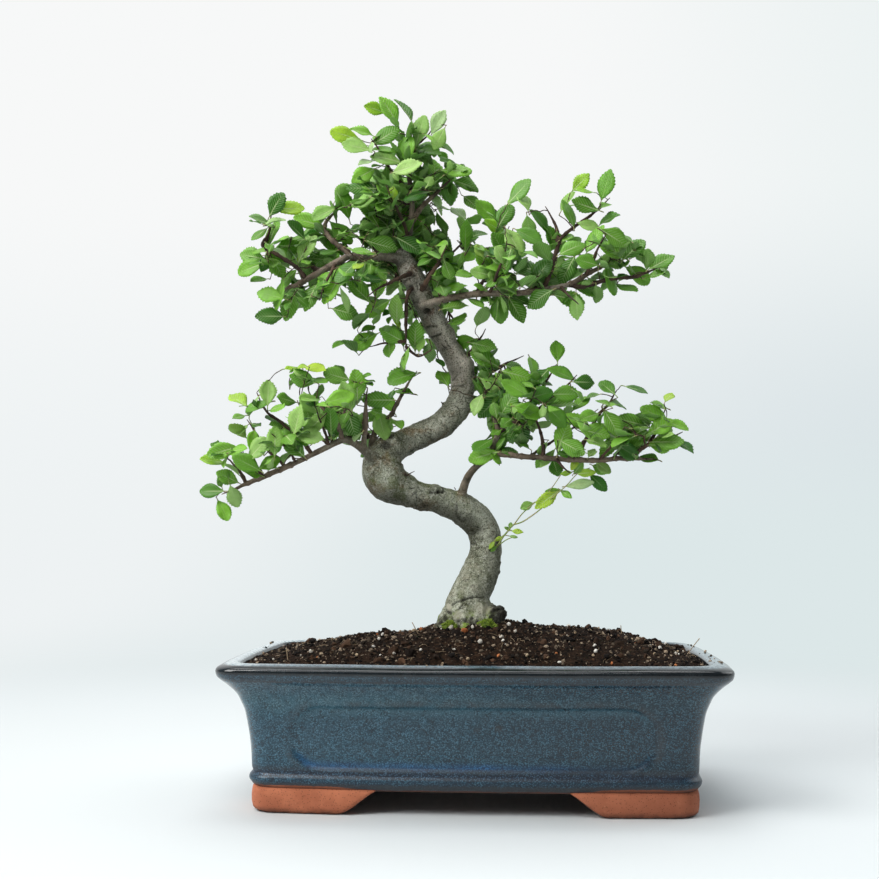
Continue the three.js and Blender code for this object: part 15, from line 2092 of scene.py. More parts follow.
        (-83.9, -42.5, 240.2, -83.5, -43.7, 239.1, 0.23, -0.61, -0.75, 0.75, -0.39, 0.54, 12.9, 7, 0, 1),
        (-84.5, -78.1, 238.7, -86, -76.9, 239.6, -0.74, 0.62, 0.24, -0.14, -0.5, 0.86, 9.9, 5, 0, 1),
        (-75.1, -62.2, 239.2, -76.7, -60.9, 239.8, -0.77, 0.64, 0.06, -0.33, -0.47, 0.82, 10.2, 5.7, 0, 1),
        (-81.9, -25.9, 264.9, -82.9, -27.4, 266.2, -0.46, -0.76, 0.45, 0.21, 0.4, 0.89, 10.6, 6, 0, 1),
        (-114.8, -45.5, 254.1, -114, -46.9, 255.7, 0.41, -0.71, 0.57, -0.49, 0.35, 0.8, 10.3, 4.8, 3, 1),
        (-119, -53.3, 265, -117.7, -51.8, 265.8, 0.65, 0.72, 0.24, 0.15, -0.44, 0.89, 10.4, 5.8, 1, 1),
        (-108.2, -44.1, 248.4, -107.3, -44.6, 247.1, 0.45, -0.27, -0.85, 0.66, -0.54, 0.52, 15.6, 7.6, 0, 0),
        (-95.9, -35.1, 250.3, -97.6, -34.2, 250, -0.83, 0.44, -0.34, 0.06, 0.69, 0.72, 13.6, 8.1, 0, 0),
        (-114.3, -44.8, 262.3, -112.9, -46.2, 262.3, 0.7, -0.69, -0.18, 0.29, 0.04, 0.96, 18.9, 11.1, 0, 0),
        (-106, -55.7, 248, -104.7, -57.1, 247.8, 0.65, -0.71, -0.28, 0.09, -0.29, 0.95, 18.2, 10, 3, 0),
        (-104.3, -55.9, 254.6, -102.5, -56.2, 255.8, 0.82, -0.13, 0.56, -0.36, -0.88, 0.33, 6.7, 3.3, 0, 2),
        (-75, -61.9, 239.1, -75.5, -63.2, 237.5, -0.25, -0.62, -0.75, 0.12, -0.79, 0.61, 9.6, 5.8, 0, 2),
        (-78.3, -67.8, 239.7, -77.7, -68.9, 240, 0.45, -0.86, 0.22, -0.16, 0.17, 0.97, 9.5, 5, 0, 2),
        (-106.2, -43.4, 228.3, -104.9, -42.8, 229.3, 0.73, 0.32, 0.6, -0.52, -0.31, 0.8, 11, 6.2, 0, 2),
        (-93.7, -56, 233.6, -93.4, -54.9, 234.3, 0.24, 0.81, 0.53, -0.22, -0.49, 0.84, 8.2, 4.3, 0, 2),
        (-88.7, -52.4, 239.5, -88.2, -51.2, 240, 0.37, 0.87, 0.33, 0.4, -0.47, 0.79, 9.8, 5.2, 0, 2),
        (-98, -30, 245.9, -99.1, -30.8, 246.8, -0.7, -0.48, 0.54, 0.58, 0.07, 0.81, 8.7, 4.6, 0, 2),
        (-104.9, -38, 258.7, -106, -37.9, 259.4, -0.85, 0.11, 0.51, 0.48, -0.25, 0.84, 6.8, 4.2, 0, 2),
        (-103.8, -56.5, 255.9, -104.6, -56.5, 257.5, -0.44, 0.04, 0.9, 0.56, -0.77, 0.31, 11.1, 5.8, 0, 2),
        (-109, -43.1, 245.9, -108.1, -42, 245.9, 0.63, 0.78, -0.03, 0.02, 0.02, 1, 8.3, 4.6, 0, 2),
        (-106.3, -54, 247.9, -104.6, -55, 247, 0.76, -0.49, -0.43, -0.06, -0.71, 0.71, 10.5, 5.1, 0, 2),
        (-74.7, -61.2, 238.7, -74.4, -61.1, 240.2, 0.2, 0.07, 0.98, 0.92, -0.35, -0.17, 6.5, 3.5, 3, 2),
        (-79.8, -70.7, 240, -81.4, -70.5, 240.2, -0.99, 0.1, 0.07, 0.02, -0.43, 0.9, 6.7, 4, 0, 2),
    ]),
    ("shoot_left_lower_2", [
        (-74, -32.3, 245.1, -73.9, -32.9, 247.4, 0.02, -0.28, 0.96, 0.5, -0.83, -0.25, 21.3, 11.7, 0, 1),
        (-50.1, -20.5, 249.2, -52, -21, 249.6, -0.97, -0.26, -0.02, 0.26, -0.96, 0.06, 21.6, 10.7, 0, 1),
        (-80.3, -40.3, 245.4, -79.8, -39.7, 243.9, 0.24, 0.29, -0.93, 0.25, -0.94, -0.23, 21.2, 10.5, 0, 1),
        (-63.1, -17.1, 245.1, -62.6, -17.3, 243.6, 0.26, -0.1, -0.96, 0.55, -0.8, 0.23, 21.7, 12.8, 0, 1),
        (-51.1, -11.3, 239.8, -52.1, -11.1, 241.9, -0.5, 0.09, 0.86, 0.09, -0.98, 0.16, 16.3, 8.1, 0, 1),
        (-54.9, -12.8, 239, -53.8, -14, 238.2, 0.55, -0.61, -0.57, 0.26, -0.52, 0.81, 13.3, 7.5, 0, 1),
        (-70.4, -17.9, 233.8, -69, -18.3, 235.5, 0.71, -0.21, 0.67, -0.31, -0.95, 0.04, 13.8, 7.2, 0, 1),
        (-95.7, -34.6, 222.2, -94.2, -35.9, 222.9, 0.74, -0.65, 0.13, -0.53, -0.46, 0.71, 13, 7.4, 0, 1),
        (-77.7, -20.6, 221.9, -77.1, -21.1, 224.1, 0.27, -0.26, 0.93, -0.82, -0.57, 0.08, 18.6, 10.6, 0, 1),
        (-74.6, -27.4, 262.5, -73.1, -28.7, 263.2, 0.74, -0.65, 0.13, -0.58, -0.54, 0.62, 10.5, 5, 0, 1),
        (-71.3, -38, 258.4, -69.9, -36.6, 259.3, 0.65, 0.72, 0.24, 0.2, -0.48, 0.86, 10.5, 5.3, 0, 1),
        (-54.4, -22.2, 238.4, -54.5, -20.7, 237.5, -0.05, 0.75, -0.66, 0.83, 0.4, 0.39, 10.7, 5.9, 0, 1),
        (-84.8, -36.7, 229.4, -83.6, -35.2, 229.2, 0.58, 0.76, -0.3, 0.03, 0.35, 0.93, 10.5, 5.2, 0, 1),
        (-68.7, -37.7, 228.4, -69.6, -39.1, 227.6, -0.47, -0.68, -0.57, -0.31, -0.47, 0.82, 10.3, 5.7, 2, 1),
        (-97, -35.8, 230.6, -95.6, -37, 230.5, 0.74, -0.62, -0.24, -0.04, -0.41, 0.91, 15.6, 7.5, 0, 1),
        (-71, -18.6, 243.1, -71.3, -19.9, 242, -0.15, -0.64, -0.75, -0.69, -0.48, 0.54, 10.6, 5.7, 0, 1),
        (-87.4, -39.7, 239.9, -86.2, -38.3, 239.5, 0.59, 0.7, -0.4, 0.64, -0.1, 0.76, 17.3, 8.8, 0, 0),
        (-91.6, -36, 229, -89.9, -35.1, 229.8, 0.87, 0.44, 0.22, -0.31, 0.14, 0.94, 17.3, 10.3, 0, 0),
        (-87.5, -42.7, 238.8, -85.8, -41.7, 238.8, 0.83, 0.53, -0.17, 0.02, 0.28, 0.96, 17.3, 9.9, 0, 0),
        (-91.5, -28.4, 236.5, -92.2, -26.5, 237.2, -0.31, 0.94, 0.16, -0.12, -0.2, 0.97, 15, 7.2, 0, 0),
        (-86, -14.5, 251.4, -87, -12.8, 251.3, -0.47, 0.85, -0.25, -0.22, 0.16, 0.96, 13.2, 6.9, 3, 0),
        (-110.8, 1.1, 236.4, -112.1, 1.6, 238.2, -0.63, 0.27, 0.72, 0.6, -0.42, 0.68, 13.1, 7.7, 0, 0),
        (-78.4, -23.4, 220, -79.4, -21.7, 220.6, -0.49, 0.86, 0.12, 0.27, 0.03, 0.96, 16.9, 8.5, 0, 0),
        (-104, -31.5, 251.8, -104.2, -29.7, 251.5, -0.12, 0.91, -0.39, 0.41, 0.41, 0.82, 14.3, 6.9, 0, 0),
        (-88.1, -15.6, 224.5, -88.1, -13.7, 225.5, -0.04, 0.95, 0.31, 0.33, -0.28, 0.9, 16.9, 9.7, 0, 0),
        (-82.7, -24.2, 233.8, -82.4, -22.5, 233.2, 0.14, 0.86, -0.5, -0.03, 0.51, 0.86, 16, 8.8, 0, 0),
        (-90.9, -36.5, 233.4, -91.2, -34.7, 234.7, -0.16, 0.88, 0.45, -0.24, -0.48, 0.84, 13.5, 7.5, 0, 0),
        (-90.3, -40.7, 238.8, -89.5, -39.2, 238.2, 0.36, 0.77, -0.53, 0.5, 0.32, 0.8, 17, 10, 0, 0),
        (-93.9, -32.2, 242.7, -93.2, -30.3, 243.3, 0.34, 0.93, 0.11, -0.13, -0.07, 0.99, 16.8, 8.3, 0, 0),
        (-82.5, -24.5, 240.6, -82.2, -22.7, 240.2, 0.15, 0.91, -0.39, -0.46, 0.41, 0.79, 14.9, 7.9, 0, 0),
        (-117.1, -16.4, 241.6, -116.9, -14.5, 242.2, 0.09, 0.99, 0.08, -0.18, -0.06, 0.98, 17.3, 9.4, 0, 0),
        (-90.9, -29.1, 227.2, -91.6, -27.6, 228.7, -0.37, 0.73, 0.58, 0.83, -0.02, 0.55, 18.7, 9.7, 0, 0),
        (-89.5, -6.4, 244.8, -89.1, -6.3, 243.2, 0.18, 0.04, -0.98, 0.51, 0.85, 0.13, 16.7, 9.2, 0, 0),
        (-93, -29.1, 249.6, -92.1, -27.4, 249.5, 0.48, 0.85, -0.23, -0.6, 0.51, 0.62, 14.1, 7.3, 0, 0),
        (-111.3, -18.5, 231.6, -111.6, -16.6, 231.4, -0.17, 0.94, -0.29, -0.4, 0.2, 0.89, 14.8, 8.1, 0, 0),
        (-112.4, -11.3, 247.5, -113, -9.6, 247.1, -0.27, 0.86, -0.43, 0.02, 0.45, 0.89, 15.7, 8.1, 0, 0),
        (-102.3, -37, 223.9, -102.5, -35, 224.2, -0.13, 0.99, -0.04, -0.07, 0.03, 1, 16.7, 8.9, 0, 0),
        (-105.1, -23.9, 242.4, -106.4, -23.9, 241.3, -0.66, 0, -0.75, -0.03, 1, 0.03, 13.1, 6.5, 0, 0),
        (-79.2, -23.9, 260.2, -77.7, -25.2, 260.5, 0.76, -0.65, -0.02, -0.15, -0.2, 0.97, 17.6, 9.3, 0, 0),
        (-109.6, 2, 237, -110, 0.7, 235.7, -0.21, -0.72, -0.66, -0.04, -0.67, 0.74, 7.2, 4.5, 0, 2),
        (-104.1, -41.1, 228, -103.9, -39.7, 228.1, 0.19, 0.97, 0.11, 0.4, -0.18, 0.9, 11.6, 5.6, 0, 2),
        (-82.8, -24.1, 233.5, -81.4, -25.8, 233.2, 0.62, -0.78, -0.1, 0.26, 0.08, 0.96, 13, 7.3, 0, 2),
        (-87.5, -42.4, 238.9, -86.8, -42.6, 240.3, 0.41, -0.1, 0.91, -0.06, 0.99, 0.13, 8.6, 5.3, 0, 2),
        (-84.5, -17, 254.1, -86, -17.7, 253.2, -0.78, -0.4, -0.49, -0.46, -0.16, 0.87, 8.9, 4.7, 0, 2),
        (-93.1, -29.3, 249.3, -92, -28.8, 249.7, 0.86, 0.4, 0.33, -0.29, -0.16, 0.94, 6.8, 4.1, 3, 2),
        (-83, -18.9, 255.5, -82.9, -17.4, 255.2, 0.05, 0.98, -0.2, -0.18, 0.21, 0.96, 6.6, 3.6, 0, 2),
        (-92.8, -5.6, 242.9, -92.2, -4.5, 244.3, 0.36, 0.54, 0.76, -0.18, -0.76, 0.62, 11.2, 6.8, 0, 2),
        (-75.2, -36.9, 259.6, -75, -38.7, 258.6, 0.06, -0.87, -0.5, 0.06, -0.49, 0.87, 10, 5.4, 0, 2),
        (-63.2, -17.1, 245.1, -64.1, -18, 243.4, -0.41, -0.44, -0.8, -0.09, -0.86, 0.51, 7.7, 4.7, 0, 2),
        (-70.9, -31.5, 258.7, -72.4, -31.8, 258.1, -0.92, -0.17, -0.36, -0.35, -0.09, 0.93, 11.2, 6.1, 0, 2),
        (-105.7, -18.6, 233.5, -107.4, -19.8, 233.9, -0.8, -0.57, 0.18, 0.49, -0.44, 0.75, 10.7, 6.5, 0, 2),
        (-79.6, -44.6, 244.9, -79.1, -44, 246.6, 0.29, 0.3, 0.91, -0.49, -0.77, 0.41, 10.4, 5.2, 0, 2),
        (-112.7, -13, 240.6, -112.3, -14.4, 240.6, 0.26, -0.96, 0.02, -0.75, -0.19, 0.63, 6.5, 3.2, 0, 2),
        (-84.6, -37.3, 229.3, -86.2, -36.8, 229.9, -0.91, 0.29, 0.3, -0.26, -0.96, 0.13, 10.2, 5, 0, 2),
        (-87.6, -42.7, 238.8, -87.3, -41.5, 239.5, 0.21, 0.81, 0.55, -0.38, -0.45, 0.81, 10.8, 5.9, 0, 2),
        (-93.9, -32.2, 242.7, -94.1, -30.3, 243, -0.08, 0.99, 0.15, 0.77, -0.03, 0.64, 11.6, 6.7, 0, 2),
        (-94.7, -3.8, 239.3, -93.7, -2.8, 239.6, 0.7, 0.69, 0.17, -0.37, 0.14, 0.92, 10.8, 6.3, 0, 2),
        (-77.9, -24.9, 260.8, -79.1, -25.1, 259.1, -0.54, -0.12, -0.83, 0.49, -0.85, -0.2, 11.7, 7.1, 0, 2),
        (-85.8, -42.6, 239.5, -86.2, -41.8, 238.5, -0.29, 0.58, -0.76, 0.16, 0.81, 0.56, 11.6, 6.8, 0, 2),
        (-68.5, -27.4, 257, -70.4, -27, 257.5, -0.94, 0.21, 0.25, 0.33, 0.59, 0.73, 8.7, 5.3, 0, 2),
        (-90.7, -10.8, 236.2, -89.4, -10.9, 236.2, 0.99, -0.14, 0.02, -0.06, -0.31, 0.95, 12.5, 7.5, 0, 2),
        (-82.6, -24.2, 239, -83, -25.6, 240.6, -0.18, -0.67, 0.72, 0.32, 0.66, 0.68, 9.6, 5.5, 1, 2),
        (-91.8, -32.6, 237, -90.5, -32.8, 238.3, 0.7, -0.1, 0.7, -0.56, -0.69, 0.46, 7.1, 3.8, 0, 2),
        (-112.4, -10.1, 245.6, -111.7, -11.5, 246.4, 0.39, -0.77, 0.5, 0.67, 0.61, 0.42, 11.9, 6.8, 0, 2),
        (-90.9, -36.1, 233.6, -92.7, -36.7, 234.3, -0.89, -0.28, 0.35, 0.42, -0.25, 0.87, 7.5, 3.8, 0, 2),
        (-62.3, -16.3, 243.6, -62.8, -15.6, 245.1, -0.28, 0.44, 0.85, -0.77, -0.63, 0.08, 12.1, 6.6, 0, 2),
        (-108.3, 3, 237.6, -109.5, 2.6, 239, -0.61, -0.24, 0.75, 0.76, 0.06, 0.64, 8.2, 4.1, 0, 2),
        (-79.4, -24, 260.4, -78.9, -24.8, 261.3, 0.39, -0.63, 0.67, -0.81, 0.1, 0.57, 6.9, 3.6, 0, 2),
        (-56.5, -17.6, 238.5, -57.5, -19.1, 239, -0.52, -0.81, 0.27, 0.33, 0.1, 0.94, 12.1, 6.6, 0, 2),
    ]),
    ("shoot_left_lower_3", [
        (-127.6, -51.2, 240.5, -127.6, -51, 242.9, -0.01, 0.11, 0.99, 0.2, -0.97, 0.11, 18.1, 10.8, 0, 1),
        (-142.7, -35.2, 222.7, -143.7, -36.6, 224.1, -0.51, -0.71, 0.5, -0.18, 0.65, 0.74, 17, 8.6, 1, 1),
        (-123.5, -47.4, 246.4, -125.4, -47.9, 246.2, -0.93, -0.24, -0.27, 0, -0.75, 0.67, 18.1, 10.2, 0, 1),
        (-139.5, -49.4, 241.5, -141, -48.4, 242.8, -0.74, 0.49, 0.46, 0.17, -0.52, 0.84, 18.8, 11, 1, 1),
        (-136.5, -46.5, 229.5, -136.5, -47.8, 228.3, 0.04, -0.63, -0.78, 0.43, -0.69, 0.58, 15.4, 7.2, 0, 1),
        (-128.2, -47.7, 239.7, -126.8, -49, 240.4, 0.74, -0.65, 0.13, -0.56, -0.51, 0.65, 15.4, 7.8, 0, 1),
        (-141.1, -41.6, 233, -139.7, -42.8, 232.9, 0.74, -0.62, -0.24, -0.15, -0.51, 0.85, 10.4, 5.1, 0, 1),
        (-121, -32.8, 233.9, -122.3, -34.3, 234.6, -0.65, -0.75, 0.13, 0.59, -0.39, 0.71, 13.1, 7.4, 0, 1),
        (-144, -32, 239.1, -145.3, -33.4, 239, -0.65, -0.72, -0.24, 0.28, -0.53, 0.8, 10.5, 5.8, 0, 1),
        (-142, -38.4, 236.4, -141.5, -39.9, 238, 0.24, -0.73, 0.64, -0.5, 0.47, 0.72, 10.4, 5.8, 2, 1),
        (-141.9, -35.9, 233.4, -142.8, -37.2, 232.7, -0.47, -0.68, -0.57, -0.06, -0.62, 0.78, 10.4, 6, 3, 1),
        (-134, -42.8, 251.1, -134.7, -44.1, 250.1, -0.32, -0.66, -0.68, -0.43, -0.54, 0.72, 10.4, 6.1, 2, 1),
        (-114.5, -21.4, 232.6, -115.4, -19.8, 233.8, -0.45, 0.79, 0.41, 0.59, -0.08, 0.8, 16.4, 8.9, 0, 0),
        (-132.8, -37, 219.7, -131.3, -38.3, 220, 0.72, -0.69, -0.02, -0.37, -0.41, 0.83, 13.9, 7.4, 0, 0),
        (-139.5, -25.2, 220.5, -138.3, -26.7, 221.1, 0.63, -0.76, 0.14, 0.05, 0.22, 0.97, 15.6, 8.5, 0, 0),
        (-112.4, -13.5, 228.2, -114.3, -13.3, 228.5, -0.99, 0.14, -0.03, 0.05, 0.5, 0.87, 16.7, 9.3, 0, 0),
        (-137.3, -37.9, 221.6, -136.5, -39.8, 221.7, 0.36, -0.92, -0.13, 0.24, -0.04, 0.97, 19.4, 10, 3, 0),
        (-111.3, -36.8, 226.7, -111.9, -35.6, 228.6, -0.28, 0.63, 0.72, 0.96, 0.2, 0.2, 18.7, 11, 0, 0),
        (-136.8, -39.4, 244.4, -136.8, -37.3, 244.5, 0.02, 1, 0.06, -0.4, -0.05, 0.91, 9.7, 5.8, 0, 2),
        (-134.6, -46.4, 242.5, -135.8, -46.3, 242.8, -0.97, 0.08, 0.25, 0.22, -0.28, 0.94, 11.3, 6.9, 0, 2),
        (-111.9, -15.6, 229.6, -113.5, -16, 228.6, -0.82, -0.25, -0.52, -0.34, -0.51, 0.79, 7.7, 4, 0, 2),
        (-115.5, -15.1, 241.2, -116.8, -13.9, 241.9, -0.68, 0.65, 0.35, 0.08, -0.41, 0.91, 7.2, 3.8, 0, 2),
        (-131.1, -44, 245, -130.1, -44, 246.8, 0.48, -0.01, 0.88, -0.87, -0.13, 0.47, 9.2, 4.7, 0, 2),
        (-117.6, -26.2, 232.8, -116.3, -27.5, 232.6, 0.69, -0.71, -0.13, -0.19, -0.35, 0.92, 9.3, 4.9, 0, 2),
        (-134.3, -40.2, 214.1, -134.6, -39, 215, -0.23, 0.79, 0.57, 0.28, -0.51, 0.81, 8.9, 4.8, 0, 2),
        (-134.3, -46.1, 242.6, -134.3, -47.8, 242.9, -0.03, -0.98, 0.2, 0.95, 0.04, 0.31, 10.2, 5.3, 0, 2),
    ]),
    ("shoot_left_lower_4", [
        (-140.2, -56.7, 206.9, -138.8, -57.1, 208.6, 0.71, -0.21, 0.67, -0.39, -0.91, 0.13, 20.6, 11.4, 0, 1),
        (-102.7, -49, 209.1, -104, -49.6, 210.8, -0.68, -0.3, 0.67, 0.41, -0.91, 0, 20.8, 10.7, 0, 1),
        (-109.1, -61.7, 221.6, -108.6, -62.3, 223.8, 0.27, -0.26, 0.93, -0.41, -0.9, -0.13, 20.5, 11.2, 3, 1),
        (-88.7, -52.4, 239.6, -90, -52.8, 238.5, -0.68, -0.18, -0.71, 0.04, -0.98, 0.21, 20.7, 10.4, 0, 1),
        (-120.1, -64.6, 208.2, -120.1, -64.4, 210.5, -0.01, 0.11, 0.99, 0.2, -0.97, 0.11, 20.5, 10.2, 0, 1),
        (-134.6, -52.4, 202.2, -132.9, -51.9, 203.6, 0.83, 0.24, 0.5, 0.18, -0.97, 0.15, 15.6, 7.7, 0, 1),
        (-110.5, -56.7, 223.3, -108.6, -57.4, 223.6, 0.94, -0.35, -0.03, -0.27, -0.79, 0.55, 19.1, 11, 0, 1),
        (-112.1, -37, 225.3, -113.5, -38.2, 226.5, -0.67, -0.64, 0.36, 0.69, -0.38, 0.61, 18.6, 10.1, 0, 1),
        (-120.3, -39.2, 206.4, -119.4, -40.6, 207.9, 0.41, -0.71, 0.57, -0.5, 0.34, 0.79, 12.9, 7.7, 0, 1),
        (-99.4, -51, 218.8, -100.7, -52.5, 219, -0.68, -0.73, -0.06, 0.45, -0.47, 0.76, 10.2, 4.9, 0, 1),
        (-119.6, -51.9, 203.8, -121.1, -50.6, 204.3, -0.77, 0.64, 0.06, -0.36, -0.5, 0.79, 10.3, 5.3, 0, 1),
        (-102.5, -36.9, 224.6, -104.2, -36, 224.6, -0.88, 0.45, -0.18, 0.05, 0.45, 0.89, 14.5, 8.4, 0, 0),
        (-121.5, -46.8, 227.4, -120.3, -45.2, 227.9, 0.62, 0.78, 0.06, -0.52, 0.35, 0.78, 18.2, 8.8, 0, 0),
        (-111.9, -48.1, 218.5, -111.9, -50.1, 218.5, 0, -0.98, -0.18, 0.46, -0.16, 0.87, 13, 7.1, 0, 0),
        (-132.1, -41.5, 217, -131, -43.1, 217.2, 0.56, -0.82, -0.11, -0.04, -0.15, 0.99, 17.4, 10.3, 3, 0),
        (-115.5, -54.4, 224, -114.9, -56.2, 223.9, 0.33, -0.92, -0.21, -0.49, -0.36, 0.8, 18.8, 9.1, 0, 0),
        (-100.8, -52.6, 234.6, -100.7, -54.6, 234.7, 0.05, -0.99, -0.14, -0.18, -0.15, 0.97, 13.2, 6.8, 0, 0),
        (-109.3, -49.8, 219.8, -109.8, -48.2, 221.3, -0.21, 0.81, 0.55, 0.56, -0.36, 0.74, 16.2, 9.4, 0, 0),
        (-126.5, -65.7, 210.9, -125.9, -67.6, 211.8, 0.27, -0.93, 0.25, -0.46, 0.1, 0.88, 16.2, 8.6, 0, 0),
        (-106.4, -42.6, 227.1, -105.9, -44.4, 227, 0.28, -0.92, -0.28, 0.36, -0.16, 0.92, 17.3, 9.6, 0, 0),
        (-105.9, -44.1, 229.4, -105.5, -45.6, 228.5, 0.22, -0.75, -0.62, 0.26, -0.57, 0.78, 12.8, 6.2, 0, 0),
        (-113.2, -49.7, 214.9, -113.2, -48.2, 215.6, 0, 0.91, 0.42, 0.75, -0.28, 0.6, 10.2, 5.3, 0, 2),
        (-107.9, -42.5, 225.4, -106.9, -43.8, 226, 0.6, -0.73, 0.31, -0.49, -0.03, 0.87, 7.3, 4.3, 0, 2),
        (-119.7, -63.2, 210.8, -121.4, -63.1, 209.5, -0.79, 0.02, -0.61, -0.51, -0.58, 0.64, 6.6, 3.5, 0, 2),
        (-109.3, -61, 221.8, -108.2, -61.7, 220.9, 0.7, -0.42, -0.58, 0.52, -0.25, 0.82, 7.6, 3.7, 0, 2),
        (-118.3, -58.5, 218.8, -119, -59, 220, -0.51, -0.33, 0.79, 0.77, 0.23, 0.59, 9.2, 5.5, 0, 2),
        (-121.1, -60.3, 217.1, -120.5, -61.7, 216.7, 0.41, -0.88, -0.24, 0.17, -0.19, 0.97, 9.7, 5.2, 0, 2),
        (-118.7, -44.3, 230.8, -118.3, -45.4, 229.7, 0.24, -0.72, -0.65, 0.24, -0.6, 0.76, 11.8, 5.7, 0, 2),
        (-118, -60.2, 215.5, -119.7, -60.6, 215.8, -0.95, -0.25, 0.19, 0.31, -0.67, 0.67, 6.9, 4, 0, 2),
        (-110.6, -49, 219.2, -109.9, -50.5, 218.3, 0.38, -0.8, -0.47, -0.59, -0.6, 0.55, 7.9, 4.3, 0, 2),
        (-111.6, -56.2, 223.4, -111.3, -56.6, 225.4, 0.12, -0.19, 0.98, -0.99, 0.01, 0.12, 7.3, 4.2, 0, 2),
        (-95.2, -54, 233.1, -96.7, -52.6, 233.2, -0.74, 0.67, 0.04, 0.48, 0.49, 0.73, 10.2, 6.1, 0, 2),
        (-111.5, -36.9, 226.3, -111, -38.4, 227.2, 0.28, -0.83, 0.49, 0.93, 0.35, 0.06, 9.8, 5.7, 0, 2),
        (-98.1, -53.3, 234.3, -99.4, -54.1, 233.5, -0.75, -0.48, -0.46, -0.23, -0.47, 0.86, 8.8, 4.5, 0, 2),
        (-106.4, -42.6, 227.1, -105, -42.4, 226.8, 0.96, 0.13, -0.24, 0.26, -0.12, 0.96, 7.6, 4.6, 1, 2),
        (-111.7, -39.8, 225.3, -110.4, -38.2, 225.2, 0.62, 0.78, -0.03, -0.5, 0.43, 0.75, 10.1, 5.3, 0, 2),
        (-102.7, -38.8, 226.6, -104.4, -38.7, 226.1, -0.95, 0.03, -0.32, -0.31, -0.22, 0.92, 9.1, 4.8, 3, 2),
        (-109, -42.5, 224.3, -108.2, -41.7, 224.9, 0.59, 0.63, 0.51, 0.27, -0.75, 0.61, 11.8, 6.5, 0, 2),
        (-119.9, -63.8, 209.6, -120.5, -62.9, 209.1, -0.56, 0.74, -0.37, 0.63, 0.67, 0.4, 11.4, 5.8, 3, 2),
        (-110.1, -58.2, 222.8, -108.4, -58.9, 223.4, 0.87, -0.36, 0.33, -0.42, -0.2, 0.89, 10.2, 5, 0, 2),
        (-106.2, -43.4, 228.4, -104.9, -44.8, 227.6, 0.63, -0.66, -0.4, 0.36, -0.21, 0.91, 12.5, 7.7, 0, 2),
        (-120.3, -59.8, 217.7, -121.3, -60.9, 217.9, -0.62, -0.77, 0.15, 0.05, 0.15, 0.99, 11.8, 6.5, 0, 2),
    ]),
    ("shoot_left_lower_5", [
        (-145, -44.9, 218.3, -146.9, -45.4, 218.1, -0.93, -0.24, -0.27, 0.22, -0.97, 0.1, 21, 10.4, 0, 1),
        (-153, -46.6, 189.9, -154.9, -46.4, 190.3, -0.99, 0.13, 0.02, -0.13, -0.98, 0.13, 18.2, 9.1, 0, 1),
        (-147.1, -35.2, 194.8, -148.5, -36.4, 195.9, -0.71, -0.59, 0.39, 0.56, -0.81, -0.2, 17.8, 9.3, 0, 1),
        (-151.6, -49.8, 195.7, -151.2, -48.8, 194.4, 0.2, 0.51, -0.84, -0.03, 0.86, 0.51, 16.9, 9.3, 0, 1),
        (-128.3, -56.6, 200.7, -130, -57.1, 202.1, -0.83, -0.29, 0.47, 0.4, -0.9, 0.15, 20.6, 10.9, 0, 1),
        (-161.5, -42.4, 186.7, -160.5, -42.6, 185.4, 0.5, -0.09, -0.86, 0.24, -0.94, 0.24, 15.6, 8.1, 0, 1),
        (-152.2, -40, 206.5, -153.9, -40.9, 207.3, -0.86, -0.47, 0.2, 0.46, -0.51, 0.73, 19.5, 10.4, 1, 1),
        (-152.8, -50.7, 213.3, -151.2, -51.8, 214, 0.83, -0.54, 0.16, -0.53, -0.65, 0.55, 15.8, 9.4, 0, 1),
        (-131, -41.4, 199.2, -132.3, -42.9, 199.8, -0.65, -0.75, 0.13, 0.66, -0.48, 0.57, 15.4, 8.5, 0, 1),
        (-147.4, -33.6, 199.3, -148.6, -34.7, 200.8, -0.59, -0.56, 0.58, 0.37, 0.45, 0.81, 15, 7.1, 0, 1),
        (-158.7, -37.1, 191, -158.6, -38.5, 192.8, 0.05, -0.75, 0.66, -0.89, 0.27, 0.37, 10.4, 6.1, 0, 1),
        (-165.6, -37.1, 215, -164.7, -38.6, 216.6, 0.41, -0.71, 0.57, -0.49, 0.35, 0.8, 10.4, 4.9, 0, 1),
        (-153.9, -42.2, 214.1, -154.2, -43.5, 213, -0.15, -0.64, -0.75, -0.68, -0.49, 0.55, 10.3, 5.5, 0, 1),
        (-135.4, -39.6, 212.6, -136.4, -37.9, 213, -0.53, 0.85, 0.01, -0.31, -0.2, 0.93, 18.3, 10.2, 0, 0),
        (-138.7, -37.6, 205.8, -140.1, -36.2, 206.4, -0.68, 0.73, 0.09, -0.06, -0.18, 0.98, 16.2, 8.8, 0, 0),
        (-153.7, -44.1, 214.1, -155.1, -45.4, 213.9, -0.7, -0.7, -0.13, 0.06, -0.23, 0.97, 10.3, 5.5, 0, 2),
        (-137.8, -38.3, 205.3, -137.8, -37, 204.6, 0.03, 0.89, -0.46, 0.53, 0.37, 0.76, 7.5, 3.7, 0, 2),
        (-151.6, -49, 195.2, -151.8, -49.5, 197.2, -0.11, -0.26, 0.96, 0.85, -0.53, -0.05, 7, 3.6, 0, 2),
        (-141.7, -53.9, 213.2, -143.3, -54.1, 213.6, -0.96, -0.12, 0.26, 0.28, -0.22, 0.93, 8.2, 4, 0, 2),
        (-138, -28, 223.3, -138.2, -28.9, 222, -0.11, -0.56, -0.82, -0.84, -0.39, 0.39, 8, 3.8, 0, 2),
        (-142.9, -50.3, 215.3, -144.6, -49.6, 215.7, -0.91, 0.37, 0.17, 0.18, -0.02, 0.98, 7, 4, 0, 2),
    ]),
    ("shoot_left_upper_1", [
        (-98, -8.7, 366.1, -99.8, -9.3, 367, -0.93, -0.28, 0.24, 0.34, -0.89, 0.29, 22.3, 12.1, 0, 1),
